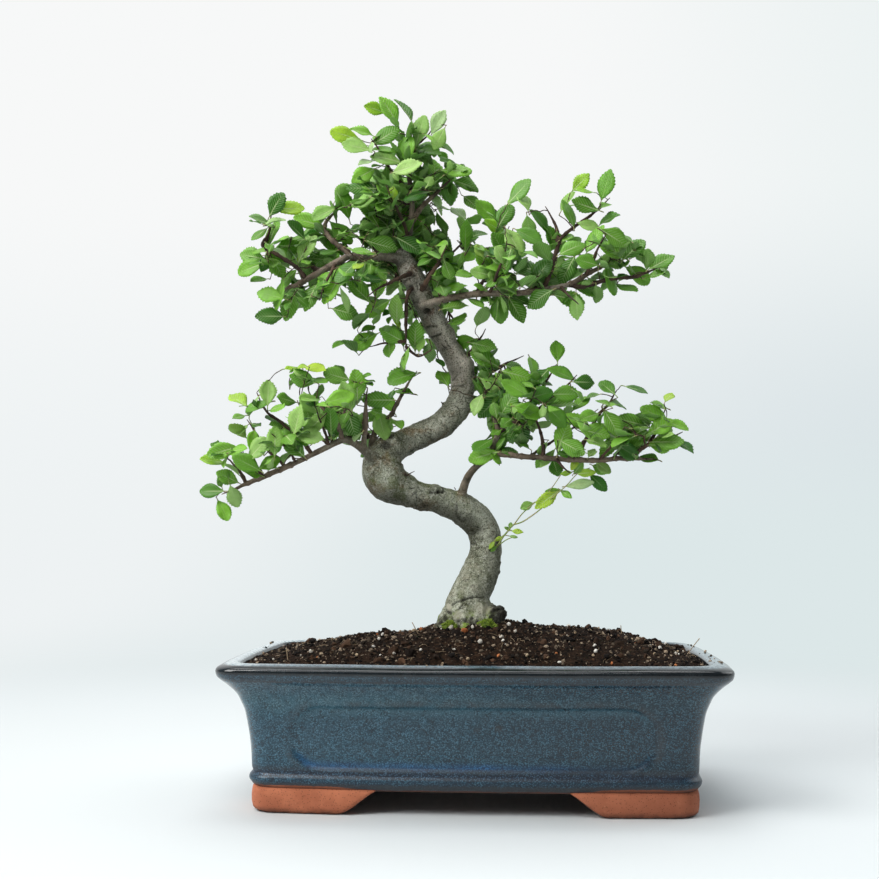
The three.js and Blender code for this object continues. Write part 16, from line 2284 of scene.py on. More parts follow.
        (-97.6, -12.3, 371.4, -96.3, -11.7, 370.5, 0.68, 0.3, -0.67, 0.41, -0.91, 0, 22.3, 11.5, 0, 1),
        (-89.7, -11, 380, -91.3, -11.5, 379.4, -0.84, -0.21, -0.5, -0.06, -0.88, 0.47, 19.2, 11, 3, 1),
        (-86.2, 7.6, 348.5, -87.9, 7, 349.9, -0.83, -0.29, 0.47, 0.54, -0.61, 0.58, 22.7, 11, 0, 1),
        (-105.9, 4.2, 338.5, -107.6, 3.6, 339.8, -0.83, -0.29, 0.47, 0.5, -0.76, 0.42, 22.6, 11.6, 0, 1),
        (-99.3, 7.1, 361.5, -101.1, 6.4, 362.4, -0.92, -0.32, 0.23, 0.33, -0.94, -0.01, 17, 8.3, 0, 1),
        (-92.6, -2.1, 370.6, -92.9, -3.5, 372.4, -0.15, -0.7, 0.69, 0.78, 0.35, 0.53, 15.4, 8.3, 0, 1),
        (-98.7, -15.3, 365.7, -97.8, -13.8, 365.2, 0.46, 0.76, -0.45, 0.3, 0.34, 0.89, 11, 5.8, 0, 1),
        (-96.4, 14.3, 358.6, -97.6, 12.8, 359.6, -0.58, -0.76, 0.3, 0.06, 0.33, 0.94, 11.2, 5.9, 0, 1),
        (-111.1, -4.7, 343.1, -111.6, -3, 344.6, -0.25, 0.81, 0.53, 0.36, -0.43, 0.83, 12.8, 7.6, 0, 0),
        (-71, 3.1, 352.4, -72.3, 4.7, 352.7, -0.62, 0.78, -0.03, 0.25, 0.23, 0.94, 18.7, 11.2, 0, 0),
        (-80.2, 5, 364.3, -79.2, 6.7, 364.4, 0.53, 0.84, -0.14, -0.21, 0.28, 0.94, 17.7, 8.6, 0, 0),
        (-92.3, -13.3, 377.4, -93.7, -11.9, 377.3, -0.68, 0.69, -0.24, -0.33, 0, 0.95, 15.7, 8.3, 0, 0),
        (-99.2, 19.6, 339.4, -100.1, 21.3, 339.3, -0.44, 0.87, -0.23, 0.14, 0.32, 0.94, 18.8, 9.7, 0, 0),
        (-119.4, 3.6, 355.4, -119.5, 5.6, 356, -0.05, 0.99, 0.13, -0.27, -0.14, 0.95, 12.6, 6.1, 0, 0),
        (-100.2, 10.9, 365.3, -99.5, 12.7, 366.2, 0.34, 0.9, 0.26, 0.03, -0.29, 0.96, 15.2, 8.4, 0, 0),
        (-103.4, 13.1, 341.3, -105, 14.1, 342.3, -0.8, 0.51, 0.3, 0.36, 0.03, 0.93, 18.6, 9.1, 0, 0),
        (-101.6, -3, 364.6, -103.1, -1.7, 364.9, -0.78, 0.63, -0.02, 0.05, 0.1, 0.99, 13.6, 7.6, 0, 0),
        (-88.8, -6.7, 345.2, -88.8, -4.7, 346.1, -0.02, 0.97, 0.24, -0.08, -0.24, 0.97, 18.9, 11.1, 3, 0),
        (-100.5, -9.1, 333.8, -100.2, -7.8, 335.8, 0.12, 0.62, 0.77, -0.5, -0.63, 0.59, 14.2, 8.4, 0, 0),
        (-94.3, 20.7, 368, -93.3, 22.3, 369.2, 0.49, 0.77, 0.4, -0.61, -0.02, 0.79, 18.1, 9.9, 0, 0),
        (-85.9, -8.9, 358.3, -86.9, -7.2, 358.9, -0.53, 0.84, 0.1, 0.39, 0.14, 0.91, 12.8, 7, 3, 0),
        (-99.3, -10, 322.8, -99.8, -8.1, 323.4, -0.27, 0.96, 0.1, 0.36, 0, 0.93, 15.1, 8.8, 0, 0),
        (-92.5, 16.8, 354.8, -90.7, 17.5, 354.5, 0.88, 0.32, -0.36, 0.19, 0.45, 0.87, 18.5, 9.4, 0, 0),
        (-133, 7.4, 344.6, -131.9, 8.7, 346, 0.55, 0.67, 0.49, -0.82, 0.32, 0.48, 16.9, 10, 0, 0),
        (-95.3, 28.2, 368.9, -94.8, 30, 369.8, 0.28, 0.93, 0.26, -0.72, 0.02, 0.69, 13.3, 7.8, 0, 0),
        (-87.9, -19, 348.5, -88, -17.2, 349.8, -0.03, 0.9, 0.44, -0.38, -0.42, 0.82, 17.6, 9.2, 0, 0),
        (-103, -2.5, 349.9, -103.2, -0.6, 350.2, -0.09, 1, -0.03, -0.01, 0.03, 1, 13.7, 7, 0, 0),
        (-107.4, 18, 323.2, -106.9, 19.5, 324.8, 0.22, 0.76, 0.62, -0.57, -0.41, 0.71, 18.1, 9.6, 0, 0),
        (-86.4, -11.6, 342, -87.3, -10, 343.1, -0.49, 0.8, 0.36, 0.68, 0.1, 0.72, 15.2, 7.4, 0, 0),
        (-89.2, -10.1, 365.4, -88.5, -8.2, 365.6, 0.37, 0.92, -0.08, 0.49, -0.12, 0.86, 14.3, 7, 0, 0),
        (-109.7, 17.4, 348.7, -110, 19.3, 348.9, -0.13, 0.99, -0.08, 0.05, 0.09, 0.99, 13.9, 7.8, 0, 0),
        (-114.5, 18, 333.1, -112.5, 17.8, 333.6, 0.99, -0.11, 0.01, 0.01, 0.18, 0.98, 17.4, 10.3, 0, 0),
        (-123.1, 2.6, 352, -124.8, 3.5, 351.7, -0.83, 0.43, -0.35, -0.16, 0.42, 0.9, 17.3, 8.5, 0, 0),
        (-108, 19.9, 345.7, -109.2, 21.5, 346.3, -0.59, 0.8, 0.1, 0.19, 0.01, 0.98, 14, 8.2, 0, 0),
        (-121.1, 6.1, 339.1, -119.1, 6.4, 339.7, 0.99, 0.15, 0.07, -0.13, 0.41, 0.9, 16.4, 9, 0, 0),
        (-92.5, -15.2, 349, -92.2, -13.8, 348.1, 0.15, 0.71, -0.69, 0.3, 0.64, 0.71, 16.3, 9.8, 0, 0),
        (-100.6, -5.5, 365.6, -99.7, -3.7, 365.7, 0.43, 0.89, -0.16, -0.34, 0.32, 0.88, 17.1, 9.3, 0, 0),
        (-119.8, -1.6, 360.4, -119, 0.1, 361.4, 0.36, 0.88, 0.3, -0.51, -0.09, 0.86, 14.3, 8.2, 0, 0),
        (-101.5, -8.7, 372.9, -103.1, -8.3, 372.2, -0.78, 0.22, -0.58, -0.61, -0.47, 0.64, 16.2, 8.3, 0, 0),
        (-79.5, 4.3, 352.3, -80, 6.2, 352.5, -0.24, 0.96, -0.13, -0.21, 0.09, 0.97, 14.9, 8.4, 0, 0),
        (-105.9, -12.7, 336.4, -105.8, -10.8, 336.2, 0.05, 0.97, -0.26, 0.2, 0.24, 0.95, 19.3, 9.9, 0, 0),
        (-97.3, 2.5, 332.3, -97.4, 4.2, 333.8, -0.04, 0.82, 0.57, 0.07, -0.56, 0.82, 17.1, 9.5, 0, 0),
        (-113.9, 4.9, 339.8, -113.9, 6.9, 339.9, -0.01, 0.99, -0.15, 0, 0.15, 0.99, 14.4, 6.9, 0, 0),
        (-125.9, 12.9, 365.4, -125.6, 14.8, 366.3, 0.17, 0.95, 0.27, -0.32, -0.21, 0.92, 16.5, 8.8, 0, 0),
        (-100.2, 34.3, 351.8, -101.1, 35.7, 353.5, -0.42, 0.67, 0.61, 0.15, -0.61, 0.77, 13.3, 7.9, 3, 0),
        (-107.2, -1.7, 354.1, -106.8, 0.3, 354.6, 0.16, 0.99, 0.06, -0.21, -0.03, 0.98, 13.4, 7.6, 0, 0),
        (-85.3, -6.4, 357.1, -86, -4.6, 357.2, -0.34, 0.93, -0.17, 0.36, 0.29, 0.89, 17.3, 8.5, 0, 0),
        (-120.8, 0.9, 355.3, -121.4, 1.9, 354.6, -0.45, 0.77, -0.45, 0.48, 0.64, 0.61, 7.2, 3.7, 0, 2),
        (-111.4, 20.6, 332.2, -111.4, 19.4, 331, 0.04, -0.7, -0.71, -0.01, -0.71, 0.7, 12.8, 6.9, 0, 2),
        (-123, 2.3, 352.3, -124.1, 2.7, 352.8, -0.86, 0.31, 0.4, 0.11, -0.66, 0.75, 11.8, 6, 0, 2),
        (-116, 5, 339.7, -116.7, 5.2, 341.2, -0.4, 0.07, 0.91, 0.83, -0.38, 0.4, 6.9, 4.1, 0, 2),
        (-93.5, 28.2, 370.3, -94.2, 30, 370.7, -0.35, 0.91, 0.22, 0.05, -0.22, 0.97, 6.6, 3.7, 0, 2),
        (-98.4, -0.1, 338.5, -98.1, -1.3, 337.8, 0.21, -0.84, -0.49, -0.61, -0.51, 0.61, 7.9, 4.7, 0, 2),
        (-90.5, 1.5, 338, -90.3, 2.3, 339, 0.16, 0.59, 0.79, -0.54, -0.62, 0.57, 7.9, 4.8, 0, 2),
        (-87.6, 23.1, 370, -89, 23.1, 370.1, -0.99, 0.03, 0.1, 0.07, -0.53, 0.85, 11, 6.7, 0, 2),
        (-105.8, -4.7, 348.5, -103.8, -4.8, 348.1, 0.98, -0.08, -0.2, 0.16, -0.36, 0.92, 6.5, 3.1, 0, 2),
        (-125.4, 9.7, 364.1, -124.3, 10.8, 364.4, 0.69, 0.69, 0.22, -0.22, -0.09, 0.97, 9.2, 4.5, 0, 2),
        (-101.1, 12.3, 335.4, -102, 13.5, 335.8, -0.54, 0.8, 0.26, 0.14, -0.22, 0.97, 6.7, 3.6, 0, 2),
        (-97, 3.1, 333.4, -98.4, 3.2, 333.2, -0.99, 0.06, -0.14, -0.09, 0.48, 0.87, 11.2, 6.3, 0, 2),
        (-107, -2.4, 352.8, -108.5, -3.2, 353.3, -0.85, -0.43, 0.3, 0.4, -0.9, -0.15, 9, 4.5, 0, 2),
        (-99.9, 17.7, 338.1, -100.8, 19.5, 338.5, -0.42, 0.89, 0.2, 0.06, -0.19, 0.98, 12.7, 6.9, 3, 2),
        (-89.8, -12.1, 341.1, -90.9, -12.2, 343, -0.49, -0.03, 0.87, 0.7, -0.61, 0.37, 7.2, 4.1, 3, 2),
        (-89.3, 28.4, 373.7, -89.7, 29.2, 372.4, -0.29, 0.53, -0.8, -0.92, -0.39, 0.07, 9.6, 5, 0, 2),
        (-122.3, 0.2, 357.2, -121.7, 0.9, 358.4, 0.4, 0.46, 0.79, -0.74, -0.35, 0.58, 6.9, 3.3, 0, 2),
        (-109.1, 21.9, 330.6, -110.5, 22.5, 330.9, -0.92, 0.35, 0.17, 0.05, -0.33, 0.94, 7.8, 4.6, 0, 2),
        (-109, 17.1, 347.9, -109.6, 16.4, 349.2, -0.37, -0.47, 0.8, 0.63, -0.76, -0.17, 8.9, 4.8, 0, 2),
        (-78, -5.5, 366, -80, -5.3, 365.9, -0.99, 0.11, -0.06, -0.07, -0.14, 0.99, 12.8, 7.1, 0, 2),
        (-78.2, 6.4, 363.2, -79.6, 5.3, 363.2, -0.82, -0.58, -0.01, 0.32, -0.46, 0.83, 6.9, 3.6, 0, 2),
        (-99.1, 8.3, 336.6, -100.6, 8.8, 336.5, -0.93, 0.37, -0.04, -0.27, -0.62, 0.74, 9.1, 5.1, 0, 2),
        (-103, 12.9, 340.3, -103.2, 14.5, 340.6, -0.1, 0.97, 0.21, 0.47, 0.23, -0.85, 7.2, 3.9, 0, 2),
        (-93.2, -10.7, 365.2, -92.1, -9.1, 364, 0.48, 0.71, -0.52, 0.11, 0.53, 0.84, 6.5, 4, 0, 2),
        (-132.6, 7.3, 344.3, -133.2, 6.6, 345.2, -0.46, -0.58, 0.67, 0.65, -0.73, -0.18, 6.9, 4.2, 0, 2),
        (-92.4, -16, 356.5, -90.7, -15.9, 357.4, 0.88, 0.05, 0.48, -0.48, 0.2, 0.86, 8, 4.4, 0, 2),
        (-98.5, -7.8, 372.6, -99.9, -6.9, 372.9, -0.82, 0.55, 0.18, 0.11, -0.16, 0.98, 11.8, 6.9, 0, 2),
        (-101.4, -3.5, 364.8, -101.2, -2.8, 363.2, 0.1, 0.38, -0.92, -0.35, 0.88, 0.32, 6.7, 3.4, 0, 2),
        (-99.5, 8.1, 362.5, -101, 7.7, 363, -0.92, -0.19, 0.34, 0.27, 0.3, 0.91, 6.8, 3.5, 1, 2),
        (-101.5, -2.6, 364.4, -102.5, -1.2, 364.4, -0.58, 0.82, 0.03, -0.03, -0.06, 1, 8.5, 5, 0, 2),
        (-111.5, -8.2, 347, -111.7, -6.8, 347.4, -0.18, 0.95, 0.24, 0.03, -0.24, 0.97, 9.6, 4.8, 3, 2),
        (-104.4, 28.5, 349.7, -103.5, 28.1, 351.1, 0.55, -0.23, 0.8, -0.55, 0.62, 0.55, 8.6, 4.5, 0, 2),
        (-67.4, 16.6, 371.7, -68.4, 16.3, 371, -0.82, -0.23, -0.53, -0.5, -0.16, 0.85, 10.8, 6, 0, 2),
        (-110.6, 4.5, 339.5, -111, 4.7, 341.4, -0.24, 0.12, 0.96, -0.21, -0.98, 0.07, 6.8, 3.8, 0, 2),
        (-100.5, 33.9, 351.7, -101.1, 34.7, 353.2, -0.33, 0.45, 0.83, 0.64, -0.54, 0.54, 12.8, 6.8, 0, 2),
        (-98.1, -13.7, 360.1, -98.9, -14.1, 361, -0.61, -0.35, 0.71, -0.27, 0.94, 0.23, 9.8, 4.9, 0, 2),
    ]),
    ("shoot_left_upper_2", [
        (-117.9, -37.1, 312.3, -119.8, -36.9, 313.3, -0.96, 0.11, 0.27, -0.09, -0.99, 0.1, 21.5, 10.7, 0, 1),
        (-130.4, -40.6, 335.8, -132.3, -40.3, 335.8, -0.96, 0.15, -0.24, -0.16, -0.99, 0, 21.5, 10.7, 0, 1),
        (-133.1, -31.3, 366.2, -132.1, -31.7, 368.2, 0.51, -0.23, 0.83, -0.16, -0.97, -0.18, 18.8, 11.1, 0, 1),
        (-133.8, -18, 349.1, -131.9, -17.5, 350.1, 0.93, 0.24, 0.27, 0.22, -0.97, 0.1, 22.2, 11, 0, 1),
        (-115.6, -25.4, 321.9, -116.1, -25.6, 320.3, -0.25, -0.13, -0.96, -0.33, -0.92, 0.21, 21.7, 12, 0, 1),
        (-111.6, -21.5, 342.6, -109.7, -20.9, 343.1, 0.97, 0.26, 0.02, 0.23, -0.86, 0.45, 22, 12.7, 0, 1),
        (-134.8, -28.7, 348.5, -133.9, -28.1, 347.2, 0.47, 0.3, -0.83, 0.49, -0.87, -0.03, 21.9, 11.7, 0, 1),
        (-120.5, -28.2, 303, -122.3, -29, 303.4, -0.92, -0.38, -0.03, 0.38, -0.92, 0.06, 19.3, 11.1, 0, 1),
        (-132.4, -31.6, 373.5, -130.4, -31.1, 374, 0.97, 0.26, 0.02, 0.24, -0.92, 0.3, 21.9, 11.5, 1, 1),
        (-115.6, -22.2, 337.8, -114.6, -22.7, 339.9, 0.51, -0.23, 0.83, -0.45, -0.89, 0.02, 21.9, 12.2, 0, 1),
        (-131.7, -38.2, 338, -133.6, -38, 338.9, -0.96, 0.11, 0.27, -0.09, -0.99, 0.1, 18.6, 11.1, 0, 1),
        (-133.4, -29.9, 346.3, -132.9, -29.7, 348.7, 0.25, 0.13, 0.96, -0.65, -0.72, 0.27, 21.8, 13, 0, 1),
        (-128.2, -26.3, 362.6, -129.7, -27.6, 363.3, -0.72, -0.67, 0.15, 0.58, -0.48, 0.66, 19.9, 10.9, 0, 1),
        (-113.7, -22.9, 336.8, -115.1, -22.4, 335.9, -0.71, 0.24, -0.67, -0.45, -0.88, 0.15, 16.4, 9.3, 0, 1),
        (-108.6, -23.1, 353.2, -109.8, -24.1, 354.8, -0.61, -0.51, 0.61, 0.77, -0.55, 0.32, 17.4, 10.2, 0, 1),
        (-121.4, -32.8, 328.2, -121.9, -33.1, 326.7, -0.25, -0.13, -0.96, -0.56, -0.79, 0.25, 21.6, 11.4, 0, 1),
        (-131.3, -31.8, 362, -132.5, -32.6, 361, -0.61, -0.41, -0.67, -0.24, -0.71, 0.66, 14.9, 7.6, 0, 1),
        (-132.9, -23.9, 329, -134.2, -25.3, 328.9, -0.65, -0.72, -0.24, 0.29, -0.54, 0.79, 13.4, 7.2, 0, 1),
        (-105.9, -14.5, 327.9, -107.6, -14.9, 327.3, -0.84, -0.21, -0.5, -0.29, -0.62, 0.73, 19, 10.2, 0, 1),
        (-130, -46.7, 341, -131.5, -45.5, 341.9, -0.74, 0.62, 0.24, -0.2, -0.56, 0.81, 13.2, 7.3, 0, 1),
        (-132.6, -47.1, 358.1, -131.4, -45.8, 359.4, 0.61, 0.67, 0.43, -0.11, -0.46, 0.88, 17.8, 10.6, 2, 1),
        (-134, -33, 342, -133.9, -34.3, 340.9, 0.04, -0.63, -0.78, 0.69, -0.54, 0.47, 13.2, 6.4, 0, 1),
        (-134, -23.2, 350.4, -132.5, -24, 349.8, 0.78, -0.42, -0.47, 0.28, -0.44, 0.85, 15.8, 9.2, 0, 1),
        (-119.5, -19.5, 357.8, -121.1, -18.4, 357.9, -0.8, 0.58, -0.15, -0.45, -0.41, 0.79, 15.1, 8.9, 0, 1),
        (-100.3, -25.6, 330.5, -101.4, -24.3, 330, -0.56, 0.69, -0.45, -0.38, 0.27, 0.88, 10.8, 6.2, 0, 1),
        (-103.4, -4.6, 338, -104.7, -6, 337.9, -0.65, -0.72, -0.24, 0.16, -0.45, 0.88, 11, 6, 0, 1),
        (-109.1, -25.4, 348, -107.7, -24, 348.5, 0.68, 0.73, 0.06, 0.37, -0.41, 0.83, 10.8, 6.2, 0, 1),
        (-134.2, -35.7, 350.7, -133.1, -36.9, 349.9, 0.55, -0.61, -0.57, 0.2, -0.57, 0.8, 10.6, 5.4, 0, 1),
        (-122, -13.5, 356.8, -120.5, -14.8, 357.1, 0.77, -0.64, -0.06, -0.36, -0.51, 0.78, 10.9, 5.5, 0, 1),
        (-105.3, -19.5, 333.3, -104.6, -18.2, 335.1, 0.32, 0.66, 0.68, -0.55, -0.46, 0.7, 10.9, 6.4, 0, 1),
        (-122.6, -1.7, 349.6, -124.4, -2, 349.1, -0.89, -0.14, -0.44, -0.46, 0.19, 0.87, 14.3, 8.1, 0, 0),
        (-126.8, -10.8, 343.2, -128.3, -9.7, 344.4, -0.74, 0.53, 0.42, 0.64, 0.35, 0.69, 15.7, 8.5, 0, 0),
        (-121.7, -8.8, 328.5, -122.8, -7.3, 328.1, -0.55, 0.73, -0.41, 0.16, 0.57, 0.81, 13.5, 7.7, 0, 0),
        (-105.9, -23.7, 337.2, -104.4, -22.4, 337.7, 0.73, 0.68, 0.04, -0.18, 0.13, 0.97, 14.3, 8.1, 0, 0),
        (-136.7, -22.1, 342.4, -135.7, -23.4, 341.6, 0.5, -0.61, -0.61, 0.25, -0.57, 0.78, 13, 6.3, 0, 0),
        (-123.2, -9.9, 321.5, -123.3, -8.6, 323.4, -0.04, 0.62, 0.78, 0.93, -0.26, 0.25, 12.9, 7, 0, 0),
        (-105.6, -18, 356.1, -106.8, -19.3, 355.6, -0.6, -0.64, -0.48, -0.41, -0.27, 0.87, 14.2, 7.6, 0, 0),
        (-134.1, -26.5, 341.5, -135.9, -26, 342.5, -0.92, 0.3, 0.27, 0.38, 0.45, 0.81, 13.6, 7.6, 0, 0),
        (-112.8, -16.3, 325.5, -112.5, -17, 327.7, 0.14, -0.36, 0.92, 0.18, 0.92, 0.34, 18.5, 9, 0, 0),
        (-121.6, -20.5, 349.7, -120.4, -20, 348.6, 0.62, 0.26, -0.74, 0.67, 0.32, 0.67, 18.3, 9.4, 0, 0),
        (-128, -12.7, 320, -126.6, -11.3, 320.1, 0.67, 0.73, -0.15, -0.39, 0.52, 0.76, 18.6, 10.6, 0, 0),
        (-130.1, -27.1, 340.2, -129.7, -28.8, 339.7, 0.22, -0.88, -0.43, -0.23, -0.47, 0.85, 13.4, 6.6, 3, 0),
        (-111.6, -32.3, 321.5, -112.2, -30.6, 322.8, -0.29, 0.86, 0.42, 0.46, -0.26, 0.85, 18.2, 10.4, 0, 0),
        (-108.4, -23.5, 336.2, -107.7, -22.2, 337.9, 0.38, 0.67, 0.64, -0.9, 0.12, 0.42, 15.8, 8.2, 0, 0),
        (-118.6, -29.3, 323.3, -118.4, -27.4, 324.1, 0.14, 0.96, 0.24, 0.8, -0.25, 0.55, 18.2, 8.9, 0, 0),
        (-121.2, -9.3, 344.9, -121.3, -10.5, 345.3, -0.1, -0.94, 0.31, -0.71, 0.29, 0.64, 11.1, 6.1, 0, 2),
        (-109.9, -24.7, 347, -109.8, -24.4, 348.5, 0.07, 0.22, 0.97, -0.52, -0.83, 0.22, 10.8, 5.4, 3, 2),
        (-120.9, -20.6, 351.9, -122.6, -19.4, 352.2, -0.8, 0.58, 0.1, 0.24, 0.16, 0.96, 9, 4.4, 0, 2),
        (-104.3, -17.2, 357, -105.5, -17.2, 356.9, -1, 0.07, -0.02, -0.02, -0.05, 1, 6.5, 3.8, 3, 2),
        (-115.3, -35.8, 315.2, -115.5, -37.1, 315.2, -0.16, -0.99, 0.01, -0.3, 0.06, 0.95, 9.2, 4.9, 0, 2),
        (-108.7, -23.7, 351.9, -107.1, -24.2, 352.7, 0.86, -0.31, 0.4, -0.5, -0.41, 0.76, 11.2, 5.4, 0, 2),
        (-122.7, -10, 323.1, -123.3, -8.8, 322.5, -0.35, 0.85, -0.39, 0.46, 0.52, 0.72, 7.3, 4.3, 0, 2),
        (-130.7, -30.5, 345.5, -131.9, -29.9, 345.7, -0.88, 0.44, 0.18, 0.1, -0.2, 0.98, 10.3, 6.4, 0, 2),
        (-121.8, -11.7, 356.2, -120.3, -12.3, 356.5, 0.92, -0.37, 0.16, -0.4, -0.79, 0.47, 10.6, 5.4, 0, 2),
        (-131, -39.4, 336.9, -132.3, -40.6, 336.4, -0.69, -0.68, -0.24, 0.08, -0.4, 0.91, 12.5, 6.2, 0, 2),
        (-111.4, -22.1, 343.4, -110.7, -23.6, 342.3, 0.36, -0.77, -0.53, 0.09, -0.54, 0.84, 12, 5.9, 0, 2),
        (-132.8, -29.9, 365.6, -132.5, -30.9, 364.9, 0.24, -0.8, -0.54, 0.19, -0.51, 0.84, 11.3, 5.9, 0, 2),
        (-133.5, -27.1, 342.3, -134.5, -27.6, 341.3, -0.69, -0.36, -0.63, -0.37, -0.57, 0.74, 10.7, 5.8, 0, 2),
        (-122.5, -9.5, 344.4, -123, -10.5, 346, -0.26, -0.53, 0.81, -0.8, -0.35, -0.48, 7.8, 4.3, 3, 2),
        (-130, -42.3, 336.9, -130.2, -44.3, 336.3, -0.09, -0.96, -0.28, 0.69, -0.26, 0.68, 12.6, 6.6, 0, 2),
        (-133.5, -34.5, 340.8, -131.9, -34.5, 340.2, 0.95, 0.03, -0.32, 0.29, 0.35, 0.89, 8.8, 4.9, 1, 2),
        (-99.8, -22.8, 326.8, -100.1, -21.3, 327.2, -0.2, 0.94, 0.26, 0.54, -0.11, 0.83, 7.3, 3.7, 0, 2),
        (-121.2, -2.5, 350.8, -121.9, -3.3, 350.2, -0.59, -0.66, -0.46, -0.71, 0.69, -0.08, 11.2, 5.6, 0, 2),
        (-120.4, -11.1, 326.4, -119.7, -10, 325.1, 0.36, 0.62, -0.7, -0.07, 0.76, 0.64, 9.3, 5.5, 3, 2),
        (-116.5, -35.3, 312.5, -116.9, -36.3, 311.2, -0.27, -0.6, -0.75, -0.02, -0.78, 0.63, 7.7, 4.3, 0, 2),
        (-133.8, -32.8, 342.6, -135.9, -33.3, 342.2, -0.96, -0.21, -0.17, -0.06, -0.47, 0.88, 9.6, 5.9, 0, 2),
        (-132, -41.4, 359.8, -133.8, -42, 360.5, -0.89, -0.29, 0.34, 0.4, -0.15, 0.91, 9, 4.6, 0, 2),
        (-114.7, -22.6, 337.3, -114.4, -21.8, 338.7, 0.15, 0.46, 0.87, 0.42, -0.83, 0.36, 7.9, 4.5, 1, 2),
        (-105.9, -15.2, 328.8, -106.3, -15.4, 326.8, -0.17, -0.12, -0.98, -0.08, -0.99, 0.13, 9.4, 4.8, 0, 2),
        (-119, -31.5, 305.7, -120, -31, 306.8, -0.64, 0.27, 0.72, 0.76, 0.16, 0.63, 12.2, 7.2, 3, 2),
        (-110.5, -24.3, 346.2, -109, -23.9, 346.1, 0.97, 0.25, -0.07, 0.17, -0.39, 0.91, 7.9, 4, 0, 2),
        (-129.8, -45.4, 339.5, -129.4, -45.5, 340.7, 0.36, -0.08, 0.93, -0.61, -0.78, 0.17, 8, 4.2, 0, 2),
        (-117, -14.3, 326.6, -116.5, -13, 326.3, 0.37, 0.9, -0.22, -0.3, 0.35, 0.89, 8.1, 4.1, 0, 2),
        (-116.9, -31, 333.5, -118.7, -30.3, 334.4, -0.85, 0.32, 0.43, 0.25, -0.47, 0.85, 12.2, 6.5, 0, 2),
    ]),
    ("shoot_left_upper_3", [
        (-71.5, -23.2, 353.5, -69.6, -22.7, 353.5, 0.93, 0.28, -0.24, 0.35, -0.86, 0.38, 21.9, 12.5, 0, 1),
        (-53.1, -11.5, 317.8, -54.9, -11.2, 317.3, -0.86, 0.18, -0.47, -0.3, -0.94, 0.18, 22.1, 11.9, 0, 1),
        (-59.2, -14.6, 341.2, -60.9, -15, 340.6, -0.84, -0.21, -0.5, -0.01, -0.92, 0.4, 22, 12, 0, 1),
        (-65.7, -8.5, 315, -65.2, -9, 317.2, 0.27, -0.26, 0.93, -0.52, -0.85, -0.08, 22.1, 13, 0, 1),
        (-47.7, 4.3, 332.6, -49.4, 5, 332.2, -0.82, 0.37, -0.43, -0.47, -0.87, 0.14, 15.3, 7.9, 0, 1),
        (-79.7, 7.9, 348, -77.8, 7.6, 347.8, 0.96, -0.11, -0.27, 0.14, -0.62, 0.77, 19.6, 10, 0, 1),
        (-46.3, -10.2, 323.9, -47.2, -8.7, 323.2, -0.41, 0.71, -0.57, -0.32, 0.47, 0.82, 16.5, 9.3, 0, 1),
        (-51.5, -3.6, 335.1, -52.6, -2.4, 336.7, -0.55, 0.61, 0.57, 0.17, -0.58, 0.79, 16.6, 8.3, 0, 1),
        (-52.1, 0.8, 311.6, -53.4, -0.6, 311.5, -0.65, -0.72, -0.24, 0.21, -0.48, 0.85, 10.9, 5.5, 0, 1),
        (-64.9, -8.6, 328.5, -66, -10, 328.1, -0.58, -0.7, -0.42, -0.04, -0.49, 0.87, 10.9, 5.5, 0, 1),
        (-48.4, -19.3, 328.1, -48.5, -17.8, 327.1, -0.05, 0.75, -0.66, 0.85, 0.38, 0.37, 10.8, 6.4, 0, 1),
        (-64.2, -4, 338.2, -64.5, -2, 338.6, -0.13, 0.99, -0.01, -0.07, 0, 1, 12.6, 7.1, 0, 0),
        (-62.5, -7.5, 330.4, -63, -5.7, 330, -0.27, 0.88, -0.4, 0.34, 0.48, 0.81, 13.9, 6.9, 0, 0),
        (-61, 2, 351.1, -61.8, 3.8, 351.6, -0.39, 0.92, 0.04, 0.3, 0.09, 0.95, 16.9, 8.9, 0, 0),
        (-53, 2.8, 334.4, -52.7, 4.7, 334.6, 0.14, 0.99, -0.08, -0.28, 0.12, 0.95, 14.8, 8.4, 0, 0),
        (-91.1, -12.3, 340.8, -89.9, -10.7, 341.1, 0.57, 0.82, -0.04, -0.12, 0.14, 0.98, 18.6, 11.1, 3, 0),
        (-74.3, -8.4, 339.9, -73.1, -7.2, 341.4, 0.59, 0.61, 0.53, -0.63, -0.07, 0.78, 17.5, 9.5, 0, 0),
        (-76.2, -20.2, 324.6, -76.7, -18.5, 325.9, -0.29, 0.86, 0.43, 0.22, -0.37, 0.9, 13.8, 6.7, 0, 0),
        (-73.3, 1, 341.8, -74.3, 2.7, 342.4, -0.5, 0.86, 0.1, 0.44, 0.15, 0.89, 14.5, 7.2, 0, 0),
        (-53.4, -1.2, 333.7, -54.6, 0.4, 334.3, -0.59, 0.8, 0.1, 0.16, -0.01, 0.99, 12.9, 6.4, 0, 0),
        (-76.2, -12.3, 347.3, -75.8, -10.6, 346.7, 0.18, 0.84, -0.51, -0.24, 0.54, 0.81, 19.5, 10.3, 0, 0),
        (-53, 2.5, 337.7, -54.7, 3.6, 338.2, -0.83, 0.55, 0.02, 0.17, 0.23, 0.96, 16.1, 7.8, 0, 0),
        (-57, -5, 342.2, -57.8, -5.7, 340.9, -0.37, -0.36, -0.86, -0.82, -0.3, 0.48, 13.2, 7, 0, 0),
        (-59.6, -1, 345.1, -60.6, 0.2, 346.8, -0.46, 0.61, 0.64, -0.6, -0.75, 0.28, 13.7, 6.9, 0, 0),
        (-54.8, 5.5, 355.3, -56, 5.9, 354.1, -0.59, 0.18, -0.79, -0.15, 0.93, 0.32, 17.3, 10.2, 0, 0),
        (-77.9, -23.4, 325.1, -78.2, -21.5, 325.5, -0.15, 0.99, 0, -0.15, -0.03, 0.99, 15.9, 9, 0, 0),
